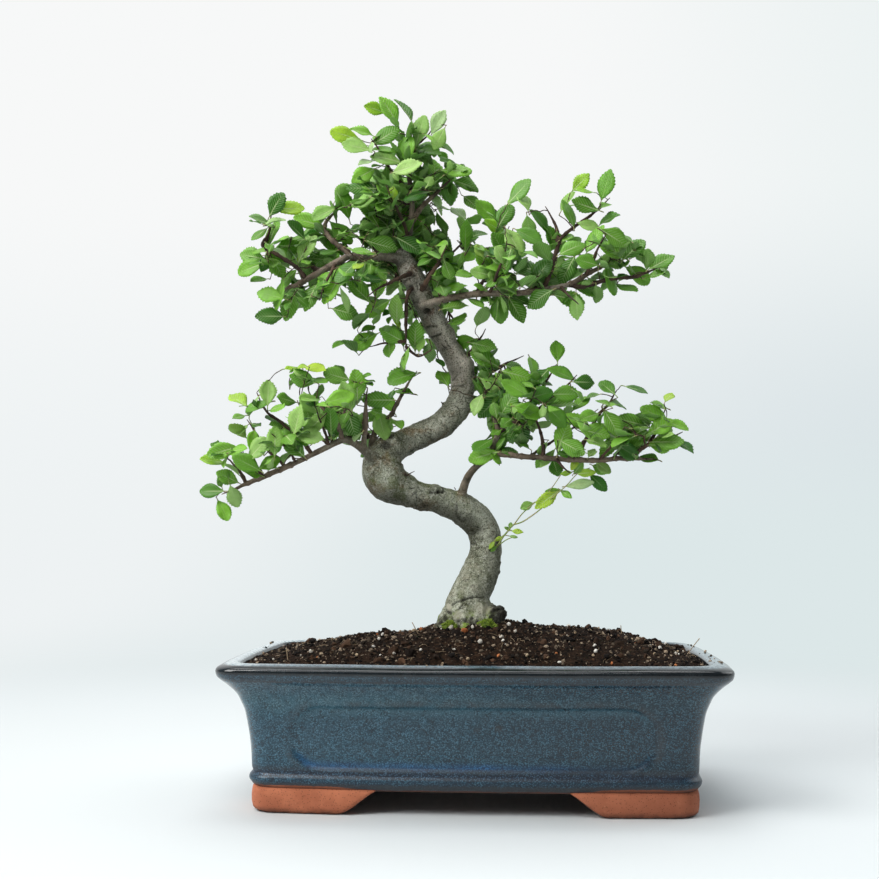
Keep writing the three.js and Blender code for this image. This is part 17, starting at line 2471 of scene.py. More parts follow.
        (-66.8, -2.4, 311.4, -67.2, -0.7, 312.8, -0.17, 0.85, 0.49, 0.82, -0.15, 0.56, 17.4, 9.4, 0, 0),
        (-86.1, 6.4, 334, -85.9, 8.4, 334.2, 0.06, 0.99, -0.12, 0.03, 0.12, 0.99, 15.2, 8.5, 0, 0),
        (-78.9, -3.3, 323.5, -78.5, -2.7, 325.8, 0.18, 0.31, 0.94, -0.96, -0.15, 0.23, 17.7, 9.8, 0, 0),
        (-74.5, -10, 321.6, -73, -9.2, 320.9, 0.76, 0.38, -0.53, 0.41, 0.35, 0.84, 16, 9.2, 0, 0),
        (-56.6, 0.6, 343.2, -58.6, 1.5, 343.6, -0.89, 0.4, 0.19, 0.27, 0.14, 0.95, 9.3, 4.8, 0, 2),
        (-73, -29.6, 341.4, -71.8, -28.8, 340.4, 0.67, 0.45, -0.6, 0.2, 0.67, 0.72, 9.1, 5.6, 0, 2),
        (-63.6, -8.4, 342.7, -64.4, -7.5, 343.1, -0.63, 0.72, 0.3, 0.39, -0.04, 0.92, 9.2, 5.5, 0, 2),
        (-74, -7.2, 340.1, -74.9, -6.5, 339.4, -0.66, 0.52, -0.54, -0.74, -0.32, 0.59, 7.4, 4.5, 0, 2),
        (-56.1, -0.8, 342.5, -57.9, -1, 342.4, -0.99, -0.14, -0.06, 0.07, -0.77, 0.64, 9.5, 4.6, 0, 2),
        (-49.4, 12.6, 327.7, -50, 12.9, 326.3, -0.34, 0.2, -0.92, -0.87, -0.44, 0.22, 9.5, 5.1, 0, 2),
        (-63.2, -7.8, 329.9, -64.5, -8.5, 331.2, -0.67, -0.36, 0.65, -0.2, 0.93, 0.31, 12, 5.8, 0, 2),
        (-64.2, -6.2, 340.8, -63.2, -5.6, 340.3, 0.81, 0.45, -0.39, 0.4, 0.07, 0.91, 10.8, 6, 0, 2),
        (-66.1, -8.4, 315.2, -65.8, -7.5, 314.1, 0.21, 0.63, -0.75, 0.75, 0.39, 0.54, 8.5, 4.5, 3, 2),
        (-73.3, 0.5, 341.7, -72.3, 1.5, 341.8, 0.67, 0.74, 0.07, 0.23, -0.3, 0.93, 12.6, 6.4, 0, 2),
        (-74.8, -12.8, 322.6, -76.2, -11.9, 322.8, -0.83, 0.55, 0.12, -0.08, -0.31, 0.95, 8.8, 4.8, 0, 2),
        (-53.7, 8.9, 339.4, -54.6, 9.9, 339.6, -0.68, 0.72, 0.13, -0.66, -0.68, 0.33, 11.2, 6.6, 0, 2),
        (-52.5, -17.5, 365.3, -53.8, -17.5, 364.1, -0.71, 0, -0.7, -0.65, 0.38, 0.66, 12.4, 6.8, 0, 2),
        (-88.1, 4, 335.8, -86.9, 3.1, 334.4, 0.58, -0.42, -0.7, 0.75, 0.61, 0.25, 8, 3.9, 0, 2),
        (-75.2, -15.5, 323.5, -76, -14.8, 324.2, -0.64, 0.55, 0.54, 0.25, -0.52, 0.82, 11.8, 5.7, 1, 2),
        (-79.2, -12.4, 342.2, -80.3, -10.7, 341.3, -0.5, 0.76, -0.41, -0.67, -0.04, 0.74, 12.6, 7.6, 3, 2),
        (-75.2, -9.1, 340.4, -74.8, -7.1, 340.1, 0.2, 0.97, -0.1, -0.09, 0.12, 0.99, 7.8, 4.7, 0, 2),
        (-77.8, -4.3, 322.9, -77, -2.9, 324.2, 0.38, 0.69, 0.61, -0.26, -0.55, 0.79, 7, 3.6, 0, 2),
        (-54.6, 6.4, 355.5, -56.2, 5.1, 355.7, -0.77, -0.63, 0.11, 0.19, -0.07, 0.98, 12.8, 7.1, 1, 2),
        (-74.3, -21.5, 345.5, -73, -22.4, 345.2, 0.81, -0.55, -0.2, 0.1, -0.21, 0.97, 6.8, 4, 0, 2),
    ]),
    ("shoot_left_upper_4", [
        (-93.6, -27.6, 308.5, -91.6, -27.8, 308.4, 0.96, -0.11, -0.27, -0.09, -0.99, 0.1, 18.7, 11.1, 0, 1),
        (-84.7, -31.9, 329.9, -85.7, -31.5, 328.6, -0.51, 0.23, -0.83, -0.5, -0.86, 0.07, 21.7, 12.7, 0, 1),
        (-65.2, -23.9, 310.6, -66.6, -24.5, 312.3, -0.68, -0.3, 0.67, 0.57, -0.79, 0.22, 21.7, 12.9, 0, 1),
        (-99.5, -26.1, 327.4, -100.4, -26.4, 326.1, -0.48, -0.16, -0.86, -0.27, -0.91, 0.32, 21.7, 12.1, 0, 1),
        (-72.4, -34.5, 338.7, -73.8, -34.9, 337.7, -0.68, -0.18, -0.71, -0.12, -0.93, 0.36, 21.4, 11.7, 0, 1),
        (-86.8, -33.2, 333.7, -88.3, -32.8, 332.7, -0.71, 0.21, -0.67, -0.42, -0.89, 0.16, 18.7, 10.6, 0, 1),
        (-60.1, -53, 338.1, -62, -53.5, 338.5, -0.97, -0.26, -0.02, 0.19, -0.73, 0.65, 13.3, 7.4, 0, 1),
        (-84.9, -41, 321.4, -84.5, -40.1, 320.1, 0.21, 0.46, -0.86, 0.77, 0.47, 0.44, 19.5, 11.1, 0, 1),
        (-98.7, -19.5, 323.3, -99, -20.8, 322.1, -0.15, -0.64, -0.75, -0.6, -0.55, 0.58, 10.7, 6.1, 0, 1),
        (-79.5, -60.2, 340.4, -78.1, -58.7, 340.5, 0.65, 0.75, -0.13, 0.61, -0.41, 0.68, 10.3, 5.5, 3, 1),
        (-66.2, -49.5, 333, -67.4, -50.8, 332.5, -0.58, -0.7, -0.42, -0.12, -0.44, 0.89, 10.3, 6.1, 1, 1),
        (-78.3, -36.1, 325.8, -79.2, -37.5, 325.1, -0.47, -0.68, -0.57, -0.29, -0.49, 0.82, 10.5, 5.5, 0, 1),
        (-59.5, -48.1, 338.1, -60.8, -49.6, 338.4, -0.68, -0.73, -0.06, 0.37, -0.41, 0.84, 10.3, 6, 0, 1),
        (-71.4, -39.9, 323.3, -70.5, -41.6, 323.8, 0.45, -0.89, 0.03, 0.48, 0.28, 0.83, 12.7, 6.7, 0, 0),
        (-66, -30.6, 336.9, -65.9, -32.3, 336.2, 0.08, -0.82, -0.57, 0.16, -0.55, 0.82, 13.7, 7.9, 0, 0),
        (-86.1, -26, 337.8, -87.7, -24.9, 338.4, -0.83, 0.54, 0.12, 0.4, 0.42, 0.81, 14.4, 8.2, 0, 0),
        (-89.4, -24.6, 315.2, -91.3, -25.3, 315.7, -0.93, -0.37, 0.02, 0.01, 0.02, 1, 14.6, 8.5, 0, 0),
        (-85.7, -29.4, 334.5, -87, -27.9, 335.3, -0.64, 0.73, 0.23, 0.62, 0.32, 0.71, 13.5, 7.7, 0, 0),
        (-81.5, -30.6, 330.3, -81.3, -32.5, 330.3, 0.11, -0.97, -0.2, 0.25, -0.17, 0.95, 19, 9.8, 0, 0),
        (-53.9, -29.7, 330.2, -54.8, -31.5, 330.3, -0.43, -0.9, -0.12, 0.69, -0.41, 0.61, 14.1, 7.4, 0, 0),
        (-101, -50.9, 312.1, -99.6, -52, 313.5, 0.7, -0.53, 0.47, -0.63, -0.17, 0.76, 13.9, 7.4, 0, 0),
        (-89.9, -19.6, 358.2, -88.7, -21.1, 358.1, 0.58, -0.76, -0.29, 0.47, 0.03, 0.88, 13.9, 7.5, 0, 0),
        (-94.4, -42.4, 324.2, -94.2, -44, 323.5, 0.11, -0.84, -0.54, 0.02, -0.54, 0.84, 15.6, 7.6, 0, 0),
        (-54.1, -41.2, 322.5, -55.8, -42.2, 323, -0.85, -0.52, 0.04, 0.39, -0.57, 0.72, 15.5, 8.8, 0, 0),
        (-89.7, -23.4, 318.2, -91.5, -23.2, 319.4, -0.92, 0.09, 0.38, 0.36, 0.54, 0.76, 15.4, 9.2, 0, 0),
        (-91.6, -22.2, 322.7, -92.3, -20.4, 323, -0.38, 0.92, -0.04, -0.3, -0.08, 0.95, 17.9, 8.9, 0, 0),
        (-99.2, -14, 322.9, -97.9, -13.4, 322.6, 0.89, 0.41, -0.21, 0.27, -0.08, 0.96, 12.7, 6.7, 0, 2),
        (-85.7, -32.5, 331.6, -84.2, -31, 332, 0.7, 0.7, 0.15, 0.13, -0.33, 0.93, 12.8, 6.5, 0, 2),
        (-90.1, -40, 323, -90.2, -41.4, 322.9, -0.07, -0.99, -0.12, -0.45, -0.07, 0.89, 7.1, 3.8, 3, 2),
        (-85.6, -21.1, 359.5, -85.2, -22.7, 359.3, 0.23, -0.97, -0.12, -0.44, -0.21, 0.87, 10.3, 6.2, 3, 2),
        (-72.8, -39.1, 323.8, -71.7, -38.8, 324.7, 0.75, 0.18, 0.64, -0.03, -0.95, 0.3, 12.9, 7.1, 0, 2),
        (-67.1, -48, 333.4, -67.2, -48.8, 332.3, -0.07, -0.58, -0.81, -0.34, -0.75, 0.56, 12.6, 6.3, 0, 2),
        (-84, -31.6, 330, -83.9, -30.5, 331.1, 0.06, 0.71, 0.7, 0.41, -0.66, 0.63, 7.3, 3.9, 0, 2),
        (-87.9, -19, 348.7, -89.2, -19.8, 348.2, -0.82, -0.49, -0.3, 0.17, -0.71, 0.69, 13, 7.5, 0, 2),
        (-62.6, -46.8, 337, -61.2, -46.1, 338.4, 0.69, 0.32, 0.65, -0.68, -0.03, 0.73, 6.7, 3.2, 0, 2),
        (-80.6, -31.5, 329.3, -78.7, -31.5, 329.4, 1, -0.04, 0.07, -0.08, -0.13, 0.99, 6.6, 3.8, 0, 2),
        (-79.7, -28.4, 329, -79, -28.4, 327.9, 0.54, 0, -0.84, 0.78, -0.37, 0.5, 7.5, 4.5, 0, 2),
        (-62, -39.2, 313.3, -61.8, -38, 313.8, 0.21, 0.9, 0.39, -0.58, -0.2, 0.79, 6.9, 3.9, 3, 2),
        (-99, -48.5, 312, -100.6, -48, 312, -0.94, 0.33, 0.01, -0.15, -0.45, 0.88, 6.6, 3.4, 3, 2),
        (-59.5, -48.3, 338.1, -60.8, -48.9, 338.4, -0.88, -0.43, 0.19, 0.37, -0.39, 0.84, 7.8, 4, 0, 2),
        (-92, -15.6, 349.9, -91.8, -16.9, 348.3, 0.09, -0.64, -0.77, -0.03, -0.77, 0.64, 11.4, 6.9, 0, 2),
        (-117.4, -27.3, 323.2, -116.3, -27.5, 322, 0.69, -0.08, -0.72, -0.07, -1, 0.05, 12.4, 6, 0, 2),
        (-100.1, -25.7, 329.9, -99.3, -24, 328.9, 0.41, 0.8, -0.44, 0.64, 0.09, 0.76, 12.3, 6.2, 0, 2),
        (-54.4, -40.8, 322.3, -55.5, -42.1, 323.3, -0.53, -0.65, 0.54, 0.74, -0.67, -0.06, 7.1, 3.9, 0, 2),
        (-99.7, -22.3, 326.1, -100.7, -22.2, 325.2, -0.75, 0.08, -0.66, -0.66, -0.11, 0.74, 7.9, 4.4, 0, 2),
        (-95.5, -27.4, 315.2, -94.5, -28.8, 314.5, 0.51, -0.77, -0.38, 0.16, -0.35, 0.92, 6.6, 4, 1, 2),
        (-87.4, -32.9, 333.6, -85.5, -32, 334.2, 0.85, 0.43, 0.3, -0.01, -0.56, 0.83, 12.6, 6.1, 0, 2),
        (-112.7, -33.6, 319.7, -111.6, -35.3, 319.5, 0.52, -0.84, -0.11, 0.14, -0.04, 0.99, 6.9, 4.2, 0, 2),
        (-76.9, -36.9, 325.2, -75.4, -36, 324.7, 0.81, 0.5, -0.31, 0.56, -0.47, 0.69, 8.1, 4.6, 0, 2),
        (-68.4, -44.5, 334.8, -69.2, -45.4, 334.1, -0.57, -0.67, -0.48, -0.03, -0.56, 0.83, 10.1, 5.4, 0, 2),
        (-84.1, -10.6, 342, -83.9, -12.3, 341.5, 0.13, -0.96, -0.25, -0.31, -0.27, 0.91, 11.7, 6, 0, 2),
        (-91.8, -28.6, 328.4, -93.1, -26.9, 327.8, -0.6, 0.76, -0.27, -0.46, -0.05, 0.88, 6.8, 3.4, 0, 2),
        (-66.4, -30.6, 337.1, -65.5, -32, 337, 0.56, -0.82, -0.09, 0.25, 0.06, 0.97, 9.9, 5.9, 3, 2),
        (-91.8, -30, 329.5, -90.4, -30, 328.5, 0.82, -0.04, -0.57, 0.41, -0.64, 0.65, 10.8, 6.5, 0, 2),
        (-86.8, -33.2, 333.7, -87.4, -32.1, 332.5, -0.33, 0.62, -0.71, -0.94, -0.15, 0.31, 8, 4.5, 0, 2),
        (-115, -35.6, 315.8, -113.6, -35.6, 314.9, 0.82, 0.03, -0.57, 0.38, -0.77, 0.51, 10.4, 5.2, 0, 2),
        (-68.2, -46.8, 333.9, -67.4, -48.2, 333.5, 0.47, -0.84, -0.28, 0.15, -0.23, 0.96, 9.7, 4.9, 0, 2),
        (-70.1, -30.6, 339, -70.1, -32.3, 337.8, 0, -0.82, -0.57, -0.14, -0.56, 0.81, 8.4, 4.4, 3, 2),
        (-98.3, -26.7, 324.2, -98.1, -28.2, 324.8, 0.09, -0.93, 0.35, 0.3, 0.36, 0.88, 8.6, 5.1, 0, 2),
    ]),
    ("shoot_right_lower_1", [
        (17.1, 4, 272.3, 15.5, 3.5, 273.7, -0.83, -0.29, 0.47, 0.33, -0.94, 0, 22.2, 11.1, 0, 1),
        (15.5, -7.8, 269.8, 17.4, -8.1, 269.7, 0.96, -0.11, -0.27, -0.09, -0.99, 0.1, 21.9, 10.8, 0, 1),
        (1, -0.2, 266.9, 2.7, -0.4, 266.3, 0.86, -0.1, -0.5, 0.17, -0.87, 0.46, 22.1, 12.7, 0, 1),
        (14.9, -12.6, 236.8, 15.9, -13.1, 238.8, 0.51, -0.23, 0.83, -0.46, -0.89, 0.03, 21.7, 12.2, 0, 1),
        (18.2, -12.1, 254.3, 16.7, -11.7, 253.4, -0.71, 0.21, -0.67, -0.2, -0.98, -0.1, 21.8, 10.9, 0, 1),
        (-5.4, -1, 289.9, -3.5, -1.2, 289.7, 0.96, -0.11, -0.27, 0.03, -0.88, 0.47, 19.1, 10.9, 0, 1),
        (-16.8, -6.6, 257.9, -17.7, -5.7, 259.9, -0.45, 0.44, 0.78, 0.23, -0.78, 0.58, 16.3, 9.5, 0, 1),
        (6.6, -8.4, 256.7, 5.7, -9.1, 255.4, -0.43, -0.39, -0.82, -0.24, -0.82, 0.52, 17.6, 9.5, 0, 1),
        (1.5, 6.1, 293.5, -0.4, 6.8, 293.5, -0.93, 0.31, -0.21, -0.31, -0.95, -0.03, 15, 8.5, 0, 1),
        (6.2, 0.6, 250.5, 6.2, 0.8, 252.8, -0.01, 0.11, 0.99, 0.2, -0.97, 0.11, 22.2, 11, 0, 1),
        (18.1, -13, 272.9, 19.4, -11.5, 273, 0.65, 0.75, -0.13, 0.75, -0.61, 0.25, 16.2, 8, 0, 1),
        (11.4, -1.9, 270.4, 12.5, -3.1, 269.7, 0.55, -0.61, -0.57, 0.12, -0.62, 0.78, 10.8, 5.1, 0, 1),
        (-2.5, 1.5, 266.1, -1.7, 0.3, 265.1, 0.4, -0.61, -0.68, 0.59, -0.39, 0.7, 13.6, 7.7, 0, 1),
        (3.7, 13.1, 268.1, 3.5, 11.6, 269.8, -0.14, -0.76, 0.64, 0.72, 0.37, 0.59, 11, 6.3, 0, 1),
        (-5.7, 5.4, 281.7, -5.8, 6.7, 283.6, -0.04, 0.63, 0.78, 0.84, -0.4, 0.37, 11.1, 5.5, 0, 1),
        (9.8, -2.7, 277.6, 10.4, -1.4, 279.4, 0.32, 0.66, 0.68, -0.45, -0.53, 0.72, 10.9, 5.3, 0, 1),
        (16.8, -21.6, 266.9, 17.7, -20, 266.4, 0.46, 0.76, -0.45, 0.26, 0.37, 0.89, 10.7, 5.3, 0, 1),
        (5.6, -20, 250.3, 7, -18.6, 251.2, 0.65, 0.72, 0.24, 0.18, -0.46, 0.87, 10.7, 5.6, 0, 1),
        (8.4, -6.1, 242.1, 8.7, -4.6, 241.2, 0.14, 0.76, -0.64, 0.71, 0.37, 0.6, 10.9, 6.1, 0, 1),
        (10.4, 10, 276.4, 9.5, 11.3, 278.1, -0.44, 0.65, 0.62, 0.68, -0.22, 0.7, 12.7, 6.8, 0, 0),
        (9.7, -5.7, 258.2, 10.7, -4, 258.3, 0.5, 0.85, -0.16, 0.09, 0.13, 0.99, 12.9, 7.7, 0, 0),
        (7.4, -2.2, 249.8, 7.1, -0.2, 249.9, -0.16, 0.98, -0.15, -0.02, 0.15, 0.99, 13.9, 7.7, 0, 0),
        (5.9, -2.7, 249, 7.6, -2.9, 250.4, 0.85, -0.07, 0.52, -0.38, 0.6, 0.71, 16, 8.4, 0, 0),
        (27.6, -9.4, 257.1, 27.4, -7.4, 257.6, -0.08, 1, 0.04, -0.32, -0.06, 0.95, 15.3, 8.2, 0, 0),
        (22.3, 4.8, 248.6, 21.3, 4.9, 250.7, -0.53, 0.03, 0.85, 0.77, -0.39, 0.5, 12.8, 6.4, 0, 0),
        (5, 6.9, 267.5, 5.4, 8.9, 267.9, 0.19, 0.98, -0.03, 0.23, -0.02, 0.97, 15.7, 7.8, 0, 0),
        (6.2, 16.9, 267.2, 6, 18, 266.7, -0.16, 0.92, -0.36, 0.13, 0.38, 0.92, 11.7, 6.3, 0, 2),
        (15.1, -10.8, 259.2, 15.7, -10, 258.4, 0.43, 0.66, -0.62, 0.81, -0.58, -0.05, 9, 4.6, 0, 2),
        (9.6, -1.6, 268, 8.8, -2, 269.4, -0.49, -0.2, 0.85, 0.87, 0.01, 0.5, 7.3, 4.4, 0, 2),
        (9.6, -0.2, 263.2, 11, -0.4, 263, 0.98, -0.15, -0.14, 0.12, -0.13, 0.98, 8.5, 4.8, 3, 2),
        (13.8, -14.6, 262.9, 14.4, -16, 262.1, 0.35, -0.81, -0.47, 0.83, 0.03, 0.56, 10.9, 5.6, 0, 2),
        (32.4, -10.1, 255.3, 31.5, -10.9, 256.1, -0.65, -0.58, 0.5, 0.38, 0.32, 0.87, 11.9, 6.6, 0, 2),
        (2.2, 3.3, 292.1, 1.8, 2.7, 291, -0.34, -0.43, -0.84, 0.09, -0.9, 0.43, 9.3, 4.6, 0, 2),
        (11.7, -5.6, 241.8, 12.1, -5, 243.7, 0.23, 0.31, 0.92, 0.16, -0.95, 0.28, 6.9, 3.4, 0, 2),
        (29.7, -9.7, 256.1, 28, -8.7, 255, -0.75, 0.45, -0.48, -0.02, 0.71, 0.71, 8.9, 4.4, 0, 2),
        (11.2, -6.4, 260.5, 10.7, -7.3, 261.2, -0.38, -0.7, 0.6, 0.61, 0.3, 0.73, 7.5, 4.5, 0, 2),
        (14.7, -11.9, 236.2, 14.3, -12.6, 237.9, -0.19, -0.4, 0.89, -0.09, -0.9, -0.43, 11.3, 6.7, 0, 2),
        (2.4, 19, 278.6, 4.1, 19.2, 278.7, 0.99, 0.13, 0.07, 0, -0.45, 0.89, 11.5, 6, 0, 2),
        (7.5, -3.4, 256.9, 8.4, -2.5, 258.1, 0.5, 0.5, 0.71, -0.03, -0.81, 0.59, 8.5, 4.8, 0, 2),
        (11.9, -9.1, 260.6, 13.5, -9.4, 260.5, 0.98, -0.18, -0.03, 0, -0.18, 0.98, 12, 6.1, 3, 2),
        (6.8, -4.7, 248.8, 7, -6.1, 249.6, 0.13, -0.85, 0.5, -0.04, 0.5, 0.86, 9.4, 5.7, 0, 2),
        (16.1, 0.4, 244.3, 14.5, 0.8, 244.5, -0.97, 0.23, 0.11, -0.02, -0.52, 0.85, 12.7, 6.2, 0, 2),
        (16, 2.6, 246.3, 16.6, 2.1, 247.5, 0.44, -0.32, 0.84, -0.89, -0.3, 0.35, 6.5, 3.5, 0, 2),
        (10.5, -1.7, 275, 9, -2.3, 275.8, -0.82, -0.31, 0.48, 0.3, 0.46, 0.83, 12.3, 6.3, 0, 2),
        (17.4, -11.8, 255.8, 16.1, -12, 254.2, -0.65, -0.12, -0.75, -0.45, -0.74, 0.51, 8.3, 4.3, 0, 2),
        (8.9, -5.9, 242.6, 7.9, -5.6, 243.5, -0.68, 0.24, 0.69, 0.6, -0.35, 0.72, 8.1, 4.4, 0, 2),
        (15.1, -10.8, 259.1, 15.6, -11.7, 257.4, 0.22, -0.42, -0.88, -0.29, -0.89, 0.35, 6.6, 3.9, 0, 2),
        (13.3, -13.4, 262.3, 12.2, -14.5, 262.3, -0.7, -0.71, -0.04, 0.18, -0.23, 0.96, 9.2, 5.7, 0, 2),
        (32.3, -10.1, 257, 30.6, -10.1, 258.3, -0.8, 0.03, 0.6, 0.55, -0.35, 0.76, 11.8, 6.2, 0, 2),
        (7, -1.1, 263.3, 6.7, -2.8, 264.4, -0.14, -0.84, 0.52, 0.31, 0.46, 0.83, 10.7, 5.2, 0, 2),
    ]),
    ("shoot_right_lower_2", [
        (53.4, -13.6, 272.2, 53.4, -13.1, 274.5, -0.02, 0.27, 0.96, 0.2, -0.94, 0.27, 17, 9.6, 0, 1),
        (43.5, -42.7, 244.1, 44.9, -42.1, 243.2, 0.68, 0.3, -0.67, 0.3, -0.95, -0.12, 20.9, 10.4, 0, 1),
        (47, -24.4, 251.9, 49, -24.6, 252.2, 0.99, -0.13, -0.02, -0.13, -0.99, 0.06, 18.4, 10.9, 0, 1),
        (23.6, -43.1, 242.5, 25.5, -42.5, 242.4, 0.93, 0.28, -0.24, 0.34, -0.9, 0.28, 20.9, 11.3, 0, 1),
        (60.6, -28.3, 259.1, 62.6, -27.8, 259.5, 0.97, 0.26, 0.02, 0.26, -0.96, 0.06, 15.8, 9.4, 0, 1),
        (66.4, -18.2, 259.9, 64.7, -18, 261.3, -0.86, 0.1, 0.5, 0.26, -0.77, 0.58, 21.6, 11.3, 0, 1),
        (36.8, -34, 248.5, 35, -33.8, 250, -0.86, 0.1, 0.5, 0.15, -0.89, 0.43, 21.2, 11.9, 0, 1),
        (49.8, -11.2, 271.8, 48.5, -11.6, 270.8, -0.68, -0.18, -0.71, -0.21, -0.88, 0.43, 18.8, 11, 0, 1),
        (31, -26.3, 248.3, 32.9, -26.6, 249.1, 0.96, -0.15, 0.24, -0.16, -0.99, 0, 18.4, 10.9, 0, 1),
        (61.3, -20.7, 240.3, 62.6, -20.1, 242.1, 0.66, 0.29, 0.7, -0.27, -0.77, 0.57, 16.4, 8.5, 0, 1),
        (34.7, -3.7, 281, 35.2, -4.9, 279.9, 0.23, -0.61, -0.75, 0.6, -0.52, 0.6, 16.1, 8.4, 0, 1),
        (43.8, -18.5, 245.5, 45.8, -18.7, 245.9, 0.99, -0.13, -0.02, -0.07, -0.61, 0.79, 21.5, 11.6, 0, 1),
        (36.3, -11.5, 229.8, 37.7, -12.8, 230.8, 0.67, -0.67, 0.3, 0.04, 0.45, 0.89, 15.9, 8.1, 0, 1),
        (81.2, -22.8, 252.1, 79.7, -21.5, 252.2, -0.74, 0.65, -0.13, -0.46, -0.36, 0.81, 15.9, 9.5, 0, 1),
        (39, -33.5, 254.2, 37.7, -32.3, 255.4, -0.67, 0.61, 0.42, 0.01, -0.56, 0.83, 10.5, 5.7, 0, 1),
        (31.8, -30.2, 247.3, 30.8, -31.5, 246.6, -0.47, -0.68, -0.57, -0.23, -0.53, 0.82, 13, 7.8, 0, 1),
        (43.2, -45.5, 244.6, 43.5, -44, 243.7, 0.14, 0.76, -0.64, 0.8, 0.29, 0.52, 15.5, 8.7, 0, 1),
        (41, -15.1, 259.2, 42.3, -13.6, 259.7, 0.68, 0.73, 0.06, 0.37, -0.41, 0.83, 10.7, 6.2, 0, 1),
        (61.3, -29.8, 254.7, 62.4, -31, 254, 0.55, -0.61, -0.57, 0.39, -0.41, 0.82, 10.4, 5.9, 0, 1),
        (41, -19.3, 237.4, 40.2, -17.8, 236.6, -0.41, 0.71, -0.57, -0.59, 0.27, 0.76, 10.6, 6.1, 0, 1),
        (43.9, -19.4, 245.9, 45.4, -20.8, 246.6, 0.74, -0.65, 0.13, -0.56, -0.51, 0.65, 10.5, 5.3, 0, 1),
        (42.4, -13.4, 253.4, 43.3, -11.7, 253.4, 0.46, 0.87, -0.19, -0.29, 0.35, 0.89, 17.1, 9.1, 0, 0),
        (58.9, -5.2, 236.3, 57.4, -4.2, 237.5, -0.76, 0.52, 0.39, 0.45, -0.02, 0.89, 15.9, 9.2, 0, 0),
        (33.6, -17, 240.9, 33.6, -18.9, 240.8, -0.03, -0.97, -0.25, 0.25, -0.25, 0.93, 15.8, 9.1, 0, 0),
        (47.6, -8.9, 253.2, 45.9, -9.9, 253.6, -0.85, -0.52, 0, 0.18, -0.3, 0.94, 15, 7.6, 0, 0),
        (26.6, -30.3, 233.3, 27.4, -31.9, 234.5, 0.41, -0.82, 0.4, -0.78, -0.09, 0.62, 18.9, 10.5, 0, 0),
        (45.8, -8.9, 263.4, 44, -8, 264.1, -0.9, 0.41, 0.15, 0.08, -0.18, 0.98, 13.4, 7.8, 0, 0),
        (34.5, -20.7, 252.6, 35.6, -19, 252.7, 0.5, 0.85, -0.13, -0.01, 0.16, 0.99, 16.1, 9.4, 0, 0),
        (33.8, -26.2, 237.3, 34, -28.2, 237.8, 0.08, -1, 0.05, 0, 0.06, 1, 15.6, 8.6, 3, 0),
        (33, -25.1, 240.1, 34.9, -25.6, 240, 0.95, -0.24, -0.22, 0.1, -0.42, 0.9, 16.5, 8.8, 3, 0),
        (46.2, -11.5, 259.7, 44.4, -12.5, 260, -0.86, -0.51, -0.06, -0.01, -0.11, 0.99, 18.9, 9.4, 0, 0),
        (55.3, -34.1, 241.2, 54.3, -35.9, 241.5, -0.49, -0.87, -0.04, 0.24, -0.18, 0.95, 14.1, 7.1, 0, 0),
        (57.3, -10.3, 236.7, 58.4, -8.6, 237.3, 0.53, 0.84, 0.07, -0.69, 0.39, 0.61, 15.4, 8.5, 0, 0),
        (31.5, -9.6, 261.6, 32.7, -8.1, 261.3, 0.58, 0.75, -0.31, -0.17, 0.49, 0.85, 16.9, 9.9, 0, 0),
        (41.9, -8.4, 260.8, 42.8, -8, 262.4, 0.45, 0.23, 0.86, -0.12, -0.94, 0.31, 10, 5, 0, 2),
        (45.9, -8.9, 254.6, 45.2, -10.2, 253.7, -0.37, -0.74, -0.55, -0.23, -0.5, 0.83, 11.2, 6.1, 3, 2),
        (33.7, -26, 237.8, 32.1, -26.1, 238.9, -0.82, -0.03, 0.58, 0.54, -0.38, 0.75, 11.9, 6.8, 1, 2),
        (33.7, -16.3, 240.3, 35.2, -16.3, 241.5, 0.78, 0.02, 0.62, -0.55, -0.46, 0.7, 6.6, 3.9, 0, 2),
        (43.7, -19.2, 245.5, 43.1, -19, 247.4, -0.27, 0.1, 0.96, -0.29, -0.96, 0.02, 8.2, 4.4, 0, 2),
        (31.3, -10.7, 233.5, 32.7, -10.8, 233.6, 0.99, -0.12, 0.03, 0.03, 0.41, 0.91, 6.8, 3.8, 0, 2),
        (25.2, -34.5, 235.7, 26.6, -36.1, 235.6, 0.65, -0.76, -0.02, 0.17, 0.12, 0.98, 8.6, 5.1, 0, 2),
        (34.6, -20.6, 237.5, 35.7, -21.9, 238.5, 0.54, -0.67, 0.5, -0.28, 0.42, 0.86, 7.2, 3.9, 0, 2),
        (26.8, -30.1, 233.3, 26.2, -30.7, 232.4, -0.49, -0.55, -0.67, -0.77, -0.09, 0.63, 10.7, 5.8, 0, 2),
        (37, -34.3, 248.5, 36.4, -35.5, 248.7, -0.44, -0.89, 0.16, -0.17, 0.26, 0.95, 10.4, 6.4, 0, 2),
        (58.2, -7.6, 236.5, 56.5, -7.6, 237.6, -0.84, -0.02, 0.55, -0.03, -1, -0.08, 8.6, 5, 3, 2),
        (41.4, -11.5, 256.6, 39.9, -12.1, 257.5, -0.83, -0.31, 0.47, 0.39, 0.29, 0.88, 11.8, 6, 0, 2),
        (43.1, -42.1, 244.5, 43.1, -42.8, 243.5, -0.05, -0.58, -0.82, 0.6, 0.64, -0.49, 10.3, 5.4, 3, 2),
        (57.9, -3.5, 235, 57.7, -5.1, 235.1, -0.17, -0.98, 0.04, -0.07, 0.05, 1, 9.4, 5.4, 0, 2),
        (26, -32, 234.2, 24.5, -32.4, 235, -0.87, -0.26, 0.41, 0.33, 0.3, 0.9, 10.6, 5.5, 0, 2),
        (58.6, -33.4, 236.1, 56.8, -33, 236, -0.97, 0.22, -0.05, -0.21, -0.81, 0.54, 9.8, 5.9, 1, 2),
        (32.9, -22.4, 235, 32.8, -24.2, 235.2, -0.06, -1, 0.07, 0.15, 0.06, 0.99, 8.4, 4.6, 0, 2),
